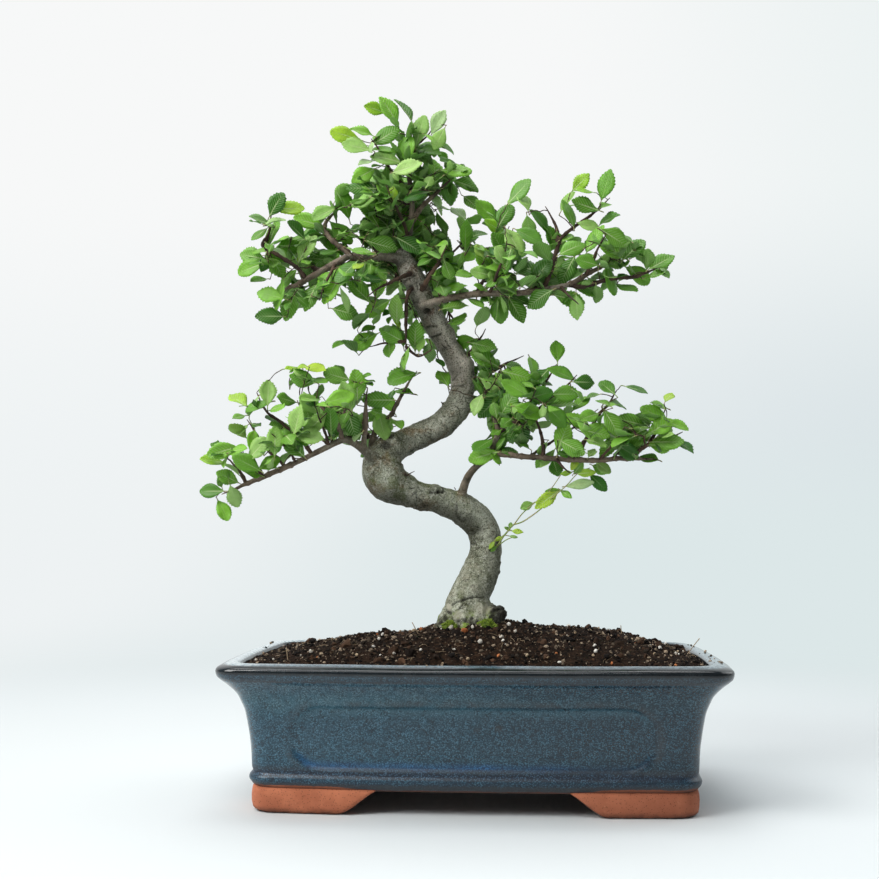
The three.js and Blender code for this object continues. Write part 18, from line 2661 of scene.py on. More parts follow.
        (23.6, -41.8, 241.4, 23, -43.8, 241.5, -0.32, -0.95, 0.08, 0.47, -0.08, 0.88, 7.9, 4.4, 0, 2),
        (54.1, 6.2, 229.9, 54.9, 5, 230.9, 0.5, -0.66, 0.56, -0.67, 0.12, 0.73, 10.6, 6.3, 0, 2),
        (56.6, -1, 233.2, 56.5, -0.9, 234.6, -0.03, 0.08, 1, 0.29, 0.95, -0.06, 10, 5.8, 0, 2),
        (31.6, -9.7, 261.1, 32.7, -9.3, 261.7, 0.84, 0.31, 0.44, -0.47, -0.01, 0.88, 7.1, 3.4, 0, 2),
        (33.1, -10.3, 253.9, 33.1, -9.1, 255, 0, 0.75, 0.66, 0.62, -0.52, 0.59, 10.7, 5.3, 3, 2),
        (42.3, -8.6, 259.6, 41.7, -9.9, 260.6, -0.36, -0.73, 0.57, -0.02, 0.62, 0.78, 11.9, 6.7, 0, 2),
        (36.4, -15.3, 250.6, 36.9, -16.7, 249.8, 0.26, -0.83, -0.49, -0.46, -0.55, 0.69, 8.1, 4.3, 0, 2),
        (40.3, -18.5, 240.6, 39.6, -19.6, 239.6, -0.45, -0.64, -0.62, -0.1, -0.66, 0.75, 10.7, 6, 0, 2),
        (25.2, -36, 236.5, 24.1, -37.1, 235.6, -0.64, -0.59, -0.5, 0.34, -0.8, 0.5, 10.5, 6.4, 0, 2),
    ]),
    ("shoot_right_lower_3", [
        (16.3, -1.9, 242.4, 17.3, -1.3, 241.1, 0.47, 0.3, -0.83, 0.61, -0.79, 0.06, 22.1, 13, 0, 1),
        (35.9, 0.7, 251.1, 34.9, 2.1, 250.5, -0.5, 0.69, -0.52, -0.1, 0.56, 0.83, 15.2, 7.5, 0, 0),
        (21, -5.4, 245.1, 22.5, -4.2, 244.8, 0.72, 0.6, -0.35, 0.12, 0.38, 0.92, 19, 11, 0, 0),
        (48.1, 30.1, 252.2, 48, 31.9, 253.3, -0.06, 0.93, 0.36, -0.19, -0.36, 0.91, 14.7, 8.3, 0, 0),
        (52.9, 4.7, 236, 54.1, 5.7, 237.5, 0.63, 0.52, 0.58, -0.78, 0.5, 0.39, 17.2, 8.3, 0, 0),
        (39.1, 9, 243, 41, 9.7, 243.4, 0.94, 0.35, 0.01, -0.24, 0.64, 0.73, 15.5, 8.1, 0, 0),
        (33.2, 12, 231.9, 32.1, 13.6, 232.4, -0.6, 0.8, 0.02, -0.04, -0.06, 1, 13.1, 7.7, 0, 0),
        (36.1, 22, 244, 35.8, 24, 244.7, -0.14, 0.98, 0.15, -0.11, -0.16, 0.98, 14, 7.3, 0, 0),
        (4.4, 6.4, 224.3, 5.7, 7.5, 225.6, 0.68, 0.58, 0.46, -0.65, 0.19, 0.73, 16.8, 8.5, 0, 0),
        (20.7, 14.3, 252.3, 20.2, 16, 251.9, -0.23, 0.89, -0.39, 0.02, 0.41, 0.91, 18.8, 10.8, 0, 0),
        (44.3, 6.5, 252.1, 44.5, 8.5, 252.9, 0.14, 0.97, 0.2, 0.52, -0.24, 0.82, 19.1, 10.1, 0, 0),
        (29, 18.1, 231.6, 29.9, 19.7, 232.8, 0.46, 0.79, 0.42, -0.64, -0.04, 0.77, 15.9, 8.3, 0, 0),
        (18.2, 6.6, 232.7, 19.4, 8.2, 233.5, 0.61, 0.77, 0.18, -0.62, 0.32, 0.72, 14.2, 7.9, 0, 0),
        (19.3, 26.3, 245.5, 17.5, 27, 245.7, -0.93, 0.36, -0.13, 0.1, 0.55, 0.83, 13.7, 7.7, 0, 0),
        (31.1, 6.6, 241.3, 31.4, 8.3, 240.7, 0.15, 0.87, -0.47, -0.03, 0.48, 0.88, 14.5, 8.3, 3, 0),
        (23.8, -0.7, 233, 23.5, 1.3, 233.4, -0.15, 0.99, -0.01, 0.02, 0.01, 1, 13.7, 6.6, 3, 0),
        (62.9, 14, 225.7, 62.8, 16, 226.2, -0.06, 1, 0.01, 0.21, 0, 0.98, 14.9, 8.1, 0, 0),
        (16, 3.7, 247.4, 15.7, 5.6, 247.2, -0.15, 0.94, -0.31, 0.45, 0.34, 0.82, 17.4, 9.5, 0, 0),
        (29, -10.7, 235.3, 30, -9, 236, 0.54, 0.83, 0.13, -0.46, 0.16, 0.87, 12.7, 6.5, 0, 0),
        (37.1, 1.6, 246.6, 37.5, 3.4, 247.8, 0.16, 0.9, 0.41, -0.44, -0.31, 0.84, 13.3, 7.6, 3, 0),
        (32, 14.6, 232.5, 30.3, 14, 233.8, -0.84, -0.26, 0.48, 0.39, 0.33, 0.86, 15, 8.2, 0, 0),
        (66.7, -2.9, 224.2, 65.3, -1.4, 225, -0.66, 0.71, 0.22, 0.62, 0.36, 0.69, 18.3, 9.4, 0, 0),
        (28.4, 13.3, 234.7, 28.6, 15.3, 234.5, 0.1, 0.95, -0.29, -0.15, 0.3, 0.94, 13.4, 7, 3, 0),
        (28.3, 42.6, 241, 29.9, 43.3, 242.3, 0.8, 0.36, 0.48, -0.58, 0.3, 0.76, 14.5, 8, 0, 0),
        (36, 34.1, 251.3, 34.7, 35.6, 251.8, -0.66, 0.75, 0.05, 0.38, 0.28, 0.88, 15.6, 9, 0, 0),
        (13.8, 14, 242.5, 13.4, 15.7, 242.1, -0.23, 0.89, -0.4, 0.36, 0.46, 0.81, 15.7, 8.7, 0, 0),
        (29.6, 39, 243, 28.4, 40.4, 243.1, -0.66, 0.75, 0.08, -0.43, -0.46, 0.78, 12.5, 6.2, 0, 2),
        (33.2, 22.3, 244.5, 34.9, 23.6, 244.8, 0.79, 0.6, 0.13, 0.36, -0.62, 0.7, 12.3, 7.1, 3, 2),
        (17.3, 7.4, 250, 16.4, 8.4, 250.5, -0.64, 0.69, 0.35, -0.17, -0.57, 0.81, 12.6, 7.2, 0, 2),
        (16.6, 5.4, 248.6, 17.2, 7, 247.5, 0.31, 0.79, -0.53, 0.7, 0.19, 0.69, 7.1, 3.8, 3, 2),
        (30.1, 35.8, 245.1, 29.1, 36.9, 245.6, -0.64, 0.7, 0.31, -0.34, -0.62, 0.7, 10.6, 5.7, 0, 2),
        (61.9, 13.3, 226.1, 62.2, 15, 225.9, 0.15, 0.98, -0.12, 0.17, 0.09, 0.98, 7.4, 4.6, 0, 2),
        (17.4, 7.4, 231.9, 16.6, 8.5, 232.1, -0.58, 0.81, 0.1, 0, -0.12, 0.99, 12.3, 6.4, 0, 2),
        (47.9, 30.1, 252.3, 49.8, 31.1, 252.1, 0.89, 0.45, -0.06, -0.03, 0.19, 0.98, 7.3, 4.3, 0, 2),
        (28.6, 14.7, 233.8, 30.3, 15.7, 232.8, 0.78, 0.43, -0.45, 0.61, -0.38, 0.7, 7.7, 4.7, 0, 2),
        (35.5, 3, 245.1, 36.4, 4.5, 245.7, 0.48, 0.8, 0.36, 0.43, -0.57, 0.7, 7.6, 4, 0, 2),
        (25.4, 10.5, 238, 25.3, 9.7, 239.2, -0.06, -0.53, 0.85, -0.31, 0.82, 0.48, 10, 5.5, 0, 2),
        (30.3, 14, 233.5, 31.6, 13.3, 232, 0.63, -0.3, -0.71, 0.47, -0.58, 0.66, 8.7, 4.3, 3, 2),
        (20.4, 4.5, 248.3, 21.8, 3.4, 248.2, 0.8, -0.6, -0.04, 0.08, 0.04, 1, 11.3, 6.2, 0, 2),
        (19.6, 1.4, 231.1, 20, 0.5, 230.3, 0.29, -0.71, -0.64, 0.47, -0.48, 0.74, 8.7, 4.3, 0, 2),
        (16.8, 13, 240.8, 15.5, 12.2, 241.5, -0.76, -0.49, 0.43, 0.42, 0.14, 0.9, 12, 7.4, 0, 2),
        (5.1, 5.6, 224.5, 5.4, 6.7, 224.8, 0.2, 0.94, 0.28, -0.58, -0.12, 0.8, 11.5, 6.4, 3, 2),
        (31.3, 28.5, 248, 30, 29.8, 249, -0.62, 0.6, 0.5, 0.64, 0.04, 0.77, 11.1, 6.2, 0, 2),
        (35.8, 33.7, 252.2, 35.6, 35.2, 251.6, -0.16, 0.92, -0.36, -0.6, 0.2, 0.78, 9.4, 5.7, 0, 2),
        (31.6, 22.4, 244.7, 31.7, 21.3, 243.1, 0.02, -0.54, -0.84, 0.99, 0.12, -0.05, 8.4, 4.4, 3, 2),
        (30.3, 33.6, 246.3, 31.2, 33.5, 245.5, 0.71, -0.04, -0.7, 0.7, -0.11, 0.71, 8.4, 5.1, 0, 2),
        (22, 25.3, 245.3, 20.7, 25.5, 246.7, -0.7, 0.1, 0.71, 0.42, -0.74, 0.52, 11.7, 6.8, 0, 2),
        (28.3, -10.2, 235.7, 28.9, -8.7, 237.1, 0.27, 0.69, 0.67, -0.11, -0.67, 0.73, 10.8, 6.2, 0, 2),
        (25, 13.4, 237.5, 25.2, 14.2, 236, 0.14, 0.47, -0.87, 0.38, -0.84, -0.4, 8.6, 5, 0, 2),
        (25.4, 24.1, 245.1, 25.6, 25.7, 245.8, 0.11, 0.9, 0.41, 0.77, -0.34, 0.54, 6.6, 3.7, 0, 2),
        (29.4, 39.4, 242.7, 27.8, 39.3, 243.1, -0.97, -0.11, 0.23, 0.24, -0.73, 0.64, 9.4, 5.4, 0, 2),
        (34.3, 22.2, 244.3, 34.5, 23.2, 242.9, 0.12, 0.58, -0.81, 0.92, 0.24, 0.31, 9.5, 5.3, 0, 2),
        (27.9, 8.9, 239.3, 29.2, 9.3, 240.7, 0.68, 0.2, 0.71, -0.55, -0.51, 0.67, 10.2, 6.2, 0, 2),
        (30, 37.3, 244.1, 31.1, 37.9, 243.4, 0.77, 0.45, -0.44, 0.41, 0.17, 0.89, 10.9, 5.3, 0, 2),
        (19, 12.5, 239.8, 17.9, 11.9, 239, -0.76, -0.4, -0.52, -0.47, -0.22, 0.86, 9, 5.2, 0, 2),
        (17.2, 7.6, 231.7, 17.3, 9.1, 231.3, 0.12, 0.96, -0.26, 0.48, 0.18, 0.86, 11, 6.3, 0, 2),
    ]),
    ("shoot_right_lower_4", [
        (110.1, -21.5, 221.3, 112, -21.7, 221.6, 0.99, -0.13, -0.02, -0.11, -0.9, 0.42, 21.2, 12, 0, 1),
        (110.8, -19.5, 230.9, 108.9, -20.1, 231.8, -0.93, -0.28, 0.24, 0.29, -0.96, 0, 21.3, 10.5, 0, 1),
        (125.4, -15.9, 233.3, 123.6, -15.7, 234.7, -0.86, 0.1, 0.5, -0.03, -0.99, 0.14, 21.5, 10.6, 0, 1),
        (85.8, -26.7, 221.5, 87.4, -26.1, 220.9, 0.83, 0.29, -0.47, 0.3, -0.95, -0.06, 21.2, 10.5, 0, 1),
        (115, -16.8, 227.4, 113.1, -16.5, 227.3, -0.96, 0.15, -0.24, -0.22, -0.94, 0.27, 21.5, 11.5, 0, 1),
        (106.3, -27.5, 224.1, 108, -27.1, 225.5, 0.84, 0.21, 0.5, 0.07, -0.95, 0.29, 21.2, 10.9, 0, 1),
        (89.9, -34, 248.6, 88.7, -33, 250.2, -0.61, 0.5, 0.62, 0.12, -0.71, 0.69, 16.3, 9.8, 0, 1),
        (94.7, -8.7, 228.7, 93.3, -9, 227.7, -0.68, -0.18, -0.71, -0.24, -0.86, 0.46, 21.6, 10.4, 0, 1),
        (92.9, -22.3, 257.5, 94.8, -22.5, 257.3, 0.96, -0.11, -0.27, 0.16, -0.57, 0.8, 15.8, 8.9, 0, 1),
        (118.9, -16.6, 235, 120.8, -16.8, 234.8, 0.96, -0.11, -0.27, 0.07, -0.81, 0.58, 15.9, 8, 0, 1),
        (108.1, -20, 219.5, 110, -19.5, 219.9, 0.96, 0.28, 0.02, 0.28, -0.96, 0.06, 18.6, 11, 0, 1),
        (83.4, -31.6, 246.2, 84.8, -30.2, 246.3, 0.7, 0.7, -0.15, 0.55, -0.4, 0.74, 17.2, 8.3, 0, 1),
        (119.6, -24.3, 245.3, 120.5, -23, 246.8, 0.47, 0.68, 0.57, -0.04, -0.63, 0.78, 13.2, 6.2, 1, 1),
        (125.7, -13.7, 223.5, 127.1, -14.9, 223.1, 0.67, -0.61, -0.42, -0.02, -0.58, 0.81, 15.7, 8.1, 0, 1),
        (125.6, -9.9, 243, 123.9, -10.9, 243.8, -0.85, -0.48, 0.2, 0.47, -0.53, 0.7, 14.7, 7.3, 0, 1),
        (118.4, -19.1, 209.3, 116.9, -17.8, 210.2, -0.74, 0.62, 0.24, -0.33, -0.65, 0.68, 15.9, 8.7, 0, 1),
        (111.8, -19.4, 230.2, 110.9, -20.9, 231.5, -0.46, -0.76, 0.45, 0.43, 0.25, 0.87, 18.2, 9.7, 0, 1),
        (98.4, -25.4, 232.3, 97.5, -24, 231.6, -0.41, 0.71, -0.57, -0.64, 0.22, 0.74, 15.8, 7.8, 0, 1),
        (102.8, -4, 214.9, 103.6, -5.4, 216.4, 0.41, -0.71, 0.57, -0.59, 0.27, 0.76, 10.6, 6, 0, 1),
        (102.1, -25.7, 226.5, 103.4, -27.1, 227.5, 0.67, -0.67, 0.3, -0.11, 0.31, 0.94, 10.3, 5.5, 2, 1),
        (113.6, -15.7, 226.1, 112.5, -14.3, 225.6, -0.56, 0.69, -0.45, -0.36, 0.29, 0.89, 10.6, 5.8, 0, 1),
        (115, -21.4, 224.3, 116.5, -22.7, 225, 0.74, -0.65, 0.13, -0.56, -0.5, 0.66, 10.4, 5.3, 0, 1),
        (92.6, -24, 229.7, 92.5, -22, 229.9, -0.08, 0.99, -0.07, 0.18, 0.09, 0.98, 16.1, 8, 0, 0),
        (93.4, -20.2, 220, 93.8, -18.5, 219.4, 0.23, 0.85, -0.48, 0.01, 0.49, 0.87, 13.1, 7.9, 0, 0),
        (98.1, -14.4, 225.8, 97.7, -12.5, 226.8, -0.21, 0.93, 0.31, 0.7, -0.08, 0.71, 16.8, 9.9, 0, 0),
        (97.4, 23.4, 231.7, 96.8, 25.3, 231.7, -0.29, 0.94, -0.17, 0.11, 0.2, 0.97, 13.6, 7.5, 0, 0),
        (87.8, -21.2, 232.2, 89.4, -20, 232.2, 0.78, 0.6, -0.2, -0.08, 0.41, 0.91, 17.6, 10.3, 0, 0),
        (98.8, -9.5, 239.6, 100.4, -8.3, 239.7, 0.79, 0.6, -0.11, -0.29, 0.54, 0.79, 18.5, 9.9, 0, 0),
        (113.4, -15.4, 228.7, 113.3, -13.4, 228.8, -0.05, 0.99, -0.16, -0.53, 0.11, 0.84, 15, 7.3, 0, 0),
        (123.4, -12.5, 220, 122.8, -14, 221.6, -0.28, -0.72, 0.63, 0.17, 0.61, 0.77, 17.6, 9.1, 0, 0),
        (122.9, -13.9, 226.2, 121.6, -13.8, 228.1, -0.68, 0.01, 0.73, 0.73, 0.05, 0.68, 14.5, 8.3, 0, 0),
        (92.6, -22.1, 230, 92.8, -24.1, 230.3, 0.1, -0.99, -0.08, 0.05, -0.08, 1, 15.2, 8.8, 0, 0),
        (106.9, -0.3, 225.1, 107.3, 1.7, 225.2, 0.15, 0.98, -0.15, 0.35, 0.09, 0.93, 18.3, 9.3, 0, 0),
        (106.1, -9.7, 235.6, 105.2, -8.3, 234.8, -0.46, 0.66, -0.59, -0.36, 0.47, 0.8, 15, 7.2, 0, 0),
        (106.1, 5.2, 241, 107.7, 6.4, 241.6, 0.81, 0.58, 0.09, -0.14, 0.03, 0.99, 19.3, 10.8, 0, 0),
        (109.8, -21.1, 222.3, 110.4, -19.6, 223.9, 0.31, 0.72, 0.62, -0.8, -0.14, 0.58, 16, 8.7, 0, 0),
        (104.2, -16.3, 236.3, 105, -18.1, 236.2, 0.4, -0.88, -0.26, 0.32, -0.13, 0.94, 15.2, 8.1, 3, 0),
        (89.6, 4.1, 238.7, 91.2, 5.3, 238.6, 0.75, 0.62, -0.22, -0.31, 0.63, 0.71, 15.5, 8.3, 0, 0),
        (112.2, -4.7, 219.7, 111.1, -3.7, 221.5, -0.55, 0.51, 0.67, 0.82, 0.16, 0.55, 13.5, 6.9, 0, 0),
        (92.6, -26.9, 235.3, 92.7, -24.9, 235.4, 0.03, 0.99, -0.14, 0.61, 0.09, 0.79, 13.4, 7.8, 0, 0),
        (92.1, -19.1, 228.9, 90.8, -17.7, 229.7, -0.67, 0.72, 0.19, 0.52, 0.27, 0.81, 19.4, 9.4, 0, 0),
        (101.9, -23.1, 210.5, 101, -21.5, 211.8, -0.47, 0.76, 0.45, 0.28, -0.35, 0.89, 15.2, 8.3, 0, 0),
        (93.6, -22.3, 221.7, 93.7, -24.2, 221.7, 0.08, -0.97, -0.23, -0.46, -0.24, 0.86, 13.7, 7.1, 0, 0),
        (110.2, 4.5, 220.9, 109.3, 6.3, 221.3, -0.45, 0.89, 0.01, 0.55, 0.27, 0.79, 19.4, 10.7, 0, 0),
        (86.2, -7.5, 223.5, 86.7, -7.8, 225.8, 0.27, -0.17, 0.95, 0.59, 0.81, -0.02, 13.9, 6.7, 0, 0),
        (121.2, -18.9, 235.7, 119.4, -19.8, 236.3, -0.89, -0.46, 0.08, 0.03, 0.11, 0.99, 16.1, 8.3, 3, 0),
        (108.9, 2.1, 223, 108.4, 3.4, 221.5, -0.29, 0.63, -0.72, -0.75, 0.31, 0.58, 7.3, 3.7, 0, 2),
        (125.1, -15.4, 230.8, 125.9, -14.5, 231.7, 0.56, 0.58, 0.59, -0.08, -0.67, 0.74, 6.8, 3.6, 1, 2),
        (92.6, -21.7, 229.9, 93.1, -21.1, 228.7, 0.36, 0.43, -0.83, 0.93, -0.06, 0.37, 10.6, 6.4, 0, 2),
        (98.6, -4.4, 219.4, 98.3, -2.9, 219.5, -0.23, 0.97, 0.08, 0.43, 0.03, 0.9, 8, 3.8, 0, 2),
        (120.9, -18.6, 235.6, 120.7, -20.2, 235.7, -0.11, -0.99, 0.02, 0.73, -0.06, 0.68, 10.7, 6.3, 0, 2),
        (107.6, 0.4, 224.5, 108.3, 1.1, 225.2, 0.59, 0.56, 0.58, 0.17, -0.79, 0.59, 9, 5.5, 0, 2),
        (106.6, -26.1, 223.1, 107.8, -27.3, 223.9, 0.61, -0.65, 0.46, -0.21, 0.42, 0.88, 7.1, 3.8, 0, 2),
        (92.6, -23.3, 229.8, 91.6, -22.2, 229.5, -0.67, 0.72, -0.17, -0.18, 0.07, 0.98, 13, 6.5, 0, 2),
        (94, -24.1, 230, 93, -25.5, 230.6, -0.53, -0.77, 0.37, 0.67, -0.11, 0.73, 10.7, 5.8, 3, 2),
        (106, 14.2, 234.8, 107, 15.7, 235.2, 0.57, 0.8, 0.18, 0.15, -0.32, 0.94, 12.7, 6.3, 0, 2),
        (95.9, -6.7, 226.2, 96.3, -7.8, 227, 0.22, -0.8, 0.55, -0.77, 0.2, 0.6, 8.1, 4.3, 0, 2),
        (92.1, -0.6, 239.2, 91.6, -0.1, 237.3, -0.24, 0.26, -0.94, -0.68, -0.74, -0.03, 12.3, 6.2, 0, 2),
        (110.8, -19.5, 230.9, 109.5, -20.5, 231.2, -0.78, -0.6, 0.18, 0.23, -0.01, 0.97, 12, 6, 0, 2),
        (104.4, 0.3, 225.6, 104.5, -0.9, 224.3, 0.06, -0.69, -0.72, -0.56, -0.62, 0.55, 11.9, 7.4, 0, 2),
        (106.2, 6.2, 238.4, 106.6, 4.4, 239.3, 0.2, -0.88, 0.43, -0.65, 0.21, 0.73, 10.7, 5.8, 1, 2),
        (109.9, -21.2, 221.9, 109.6, -19.4, 222.4, -0.13, 0.95, 0.28, 0, -0.29, 0.96, 8.9, 4.6, 0, 2),
        (121.1, -22.9, 241.4, 120, -21.9, 242.5, -0.59, 0.55, 0.59, 0.44, -0.38, 0.81, 6.9, 3.5, 0, 2),
        (101.7, -22.7, 210.7, 101.3, -24.6, 211.3, -0.22, -0.93, 0.29, 0.42, 0.18, 0.89, 7.4, 3.8, 0, 2),
        (93.3, -9.9, 218.5, 92.7, -9, 219.5, -0.43, 0.63, 0.65, 0.14, -0.66, 0.73, 12.5, 6.8, 0, 2),
        (86.4, -7.6, 223.4, 86, -8.7, 224.3, -0.29, -0.72, 0.63, -0.25, -0.58, -0.78, 6.7, 3.5, 0, 2),
        (110.4, -19.4, 231.1, 110.2, -17.6, 231.9, -0.11, 0.92, 0.37, -0.26, -0.38, 0.89, 8.6, 4.2, 0, 2),
        (96.1, -5, 240.2, 96, -3, 239.2, -0.05, 0.88, -0.47, 0.08, 0.47, 0.88, 6.6, 3.9, 3, 2),
        (90.7, 0.7, 239.2, 89.2, 2, 238.5, -0.72, 0.61, -0.33, -0.29, 0.16, 0.94, 8.2, 4.1, 0, 2),
        (113.6, -16, 226.1, 112.1, -14.8, 226.6, -0.76, 0.6, 0.24, -0.54, -0.79, 0.29, 10.5, 6.5, 3, 2),
        (100.1, -4.2, 217.8, 100.5, -5.6, 217.4, 0.26, -0.94, -0.22, -0.07, -0.25, 0.97, 11.3, 6.9, 0, 2),
        (104.7, -12.5, 236.2, 104, -10.8, 236.7, -0.4, 0.88, 0.26, -0.5, -0.44, 0.74, 7.4, 4.3, 0, 2),
        (95.8, -15.7, 227.2, 95.5, -14.8, 226, -0.18, 0.6, -0.78, -0.17, 0.76, 0.63, 6.6, 3.2, 0, 2),
        (92.3, -19.2, 218.7, 92.8, -21.1, 218.9, 0.23, -0.97, 0.13, 0.43, 0.22, 0.87, 8.7, 5.2, 3, 2),
        (123, -13.9, 226.2, 122.1, -12.8, 226.2, -0.59, 0.81, 0.02, -0.48, -0.37, 0.79, 10.6, 5.2, 0, 2),
        (90.8, -37.5, 221.4, 90.7, -36.4, 220.9, -0.08, 0.92, -0.39, -0.44, 0.32, 0.84, 7.8, 4.3, 3, 2),
        (108.1, 11.7, 234.9, 107.7, 12.5, 236.2, -0.23, 0.5, 0.84, -0.27, -0.86, 0.43, 7.5, 4.6, 0, 2),
        (102.9, -26.1, 226.1, 101.5, -26.6, 226, -0.94, -0.35, -0.06, 0.07, -0.35, 0.93, 9.7, 4.7, 3, 2),
        (93.5, -21.9, 221.4, 92.8, -22.1, 222.9, -0.46, -0.08, 0.88, 0.83, 0.3, 0.46, 11.3, 6.4, 0, 2),
        (112.8, -17.5, 224.3, 113.3, -18.7, 222.9, 0.28, -0.64, -0.72, 0.67, -0.4, 0.62, 11.3, 6, 0, 2),
        (100.8, -12.7, 239.3, 99.1, -13, 238.4, -0.87, -0.15, -0.46, -0.41, 0.73, 0.54, 8.3, 5, 0, 2),
        (94.1, -17.2, 228, 93.7, -15.9, 228.2, -0.31, 0.94, 0.1, -0.23, -0.18, 0.96, 11.1, 6.8, 0, 2),
        (98.4, 22.2, 232, 98.5, 23.7, 231.4, 0.06, 0.91, -0.4, -0.11, 0.4, 0.91, 12.7, 6.6, 0, 2),
        (102, 18, 233.7, 102.1, 19, 232.6, 0.06, 0.7, -0.71, 0.93, 0.23, 0.3, 11.3, 5.8, 0, 2),
        (104.6, -16.6, 235.9, 103.1, -17.1, 235.9, -0.96, -0.28, 0.03, 0.08, -0.16, 0.98, 9.4, 5.3, 0, 2),
        (88.4, -39.9, 222.7, 88.5, -38.6, 223.8, 0.07, 0.76, 0.65, 0.27, -0.64, 0.72, 10.3, 5, 3, 2),
        (92.6, -23.2, 229.8, 93.5, -22.3, 230.1, 0.72, 0.66, 0.21, -0.09, -0.21, 0.97, 12, 6.9, 0, 2),
        (103.9, 16, 234.3, 102.5, 16, 234.4, -1, 0, 0.01, 0.01, -0.44, 0.9, 11.7, 6.4, 0, 2),
        (94.8, -8.5, 228.5, 93.2, -8, 229.6, -0.79, 0.26, 0.55, 0.6, 0.15, 0.79, 7.8, 3.9, 0, 2),
        (113, -18, 229.2, 113.7, -18.7, 230.2, 0.48, -0.53, 0.7, -0.58, -0.79, -0.21, 7.3, 4.4, 1, 2),
        (111.6, -19.4, 230.3, 110.5, -19.3, 229.4, -0.75, 0.07, -0.66, -0.57, 0.43, 0.7, 9.3, 4.6, 0, 2),
        (91.3, -23.3, 230.3, 90.2, -23.5, 231.4, -0.7, -0.15, 0.7, 0.66, -0.48, 0.57, 9.8, 5.9, 0, 2),
        (97.9, -3.7, 222.8, 97.2, -2.8, 224.2, -0.37, 0.5, 0.78, -0.93, -0.27, -0.27, 10.2, 5.5, 0, 2),
        (101.5, 0.9, 226.1, 102.4, -0.5, 225.6, 0.51, -0.81, -0.3, -0.07, -0.39, 0.92, 7.6, 4.7, 3, 2),
        (106.1, 5.7, 239.7, 106.9, 5.7, 240.7, 0.6, 0.03, 0.8, -0.8, 0.06, 0.6, 9.6, 5.7, 0, 2),
    ]),
    ("shoot_right_lower_5", [
        (16.9, -19.6, 216.2, 15, -19.2, 216.1, -0.96, 0.15, -0.24, -0.16, -0.99, 0, 21.6, 10.7, 0, 1),
        (24.2, -14.1, 241.1, 25.2, -13.5, 239.8, 0.47, 0.3, -0.83, 0.62, -0.78, 0.07, 21.7, 12.8, 0, 1),
        (11.7, -9.6, 239, 12.1, -9, 237.5, 0.24, 0.29, -0.93, 0.5, -0.85, -0.14, 21.9, 11.8, 0, 1),
        (13, -10.8, 225.5, 11.7, -12.1, 225, -0.64, -0.63, -0.44, -0.1, -0.5, 0.86, 20, 11.8, 0, 1),
        (15.1, -24.1, 215.1, 16.5, -22.7, 215.6, 0.68, 0.73, 0.06, 0.48, -0.5, 0.72, 15.9, 8.9, 0, 1),
        (41.9, -15.7, 230, 40.2, -15.5, 231.4, -0.86, 0.1, 0.5, 0.35, -0.6, 0.72, 21.6, 11.2, 0, 1),
        (10.1, -14, 218.2, 10.9, -15.2, 217.3, 0.4, -0.61, -0.68, 0.5, -0.48, 0.72, 13.2, 7.7, 0, 1),
        (47, -28.5, 222.6, 46.2, -27.1, 221.9, -0.41, 0.71, -0.57, -0.4, 0.42, 0.82, 13.1, 6.8, 0, 1),
        (27, -8.2, 240.1, 25.1, -7.9, 240, -0.96, 0.15, -0.24, -0.28, -0.66, 0.7, 18.9, 9.4, 0, 1),
        (36.4, -20.9, 216.5, 35, -19.7, 217.7, -0.67, 0.61, 0.42, 0.16, -0.43, 0.89, 10.6, 6.1, 0, 1),
        (14.4, -5, 212, 14.5, -6.5, 213.7, 0.05, -0.75, 0.66, -0.82, 0.35, 0.45, 10.7, 5.1, 0, 1),
        (26.2, -15, 233.2, 25.4, -13.8, 234.9, -0.4, 0.61, 0.68, 0.52, -0.46, 0.72, 10.7, 5.2, 0, 1),
        (17.4, -17.1, 215.2, 17.6, -15.1, 216, 0.09, 0.98, 0.16, 0.02, -0.17, 0.99, 18.9, 10.9, 0, 0),
        (20.4, -12.9, 213.9, 19.2, -11.5, 215, -0.63, 0.7, 0.32, 0.34, -0.12, 0.93, 17, 9.8, 0, 0),
        (22.1, -17.8, 228.7, 22.3, -16, 229.9, 0.08, 0.9, 0.44, -0.22, -0.41, 0.89, 13.5, 7.6, 0, 0),
        (17.6, -15.4, 233.2, 19.3, -14.3, 233.4, 0.84, 0.53, -0.09, 0.11, -0.01, 0.99, 16.4, 8.2, 0, 0),
        (34.6, -20.6, 237.5, 33.5, -19, 238, -0.57, 0.82, 0.04, 0.37, 0.22, 0.9, 13, 6.5, 0, 0),
        (27.5, -9.6, 236.2, 26.9, -10.9, 235.2, -0.28, -0.66, -0.7, 0.55, -0.7, 0.44, 15.2, 8.9, 0, 0),
        (28.6, -24, 229.5, 28.8, -22.3, 228.9, 0.08, 0.85, -0.52, 0.2, 0.5, 0.84, 14.1, 8.3, 0, 0),
        (24.3, -12.6, 235.6, 24.8, -14.2, 234.9, 0.25, -0.79, -0.56, 0.33, -0.47, 0.81, 13.3, 7.2, 0, 0),
        (11.4, -15.9, 215.4, 11.7, -14.1, 216.6, 0.14, 0.9, 0.41, -0.28, -0.36, 0.89, 17.3, 9.6, 0, 0),
        (12.4, 12.6, 225.8, 12.6, 10.8, 225.5, 0.1, -0.94, -0.33, 0.47, -0.25, 0.85, 17, 9.3, 0, 0),
        (11.6, -15.3, 215.1, 12.8, -15.6, 216.5, 0.64, -0.19, 0.75, -0.66, -0.63, 0.41, 11.6, 6.2, 0, 2),
        (25.5, -15.5, 232.4, 26.1, -17.3, 231.8, 0.27, -0.91, -0.3, -0.52, -0.4, 0.75, 10, 5.2, 0, 2),
        (29.9, -26.2, 233.1, 28.1, -26.3, 232, -0.86, -0.06, -0.51, -0.49, -0.15, 0.86, 11.6, 6.4, 0, 2),
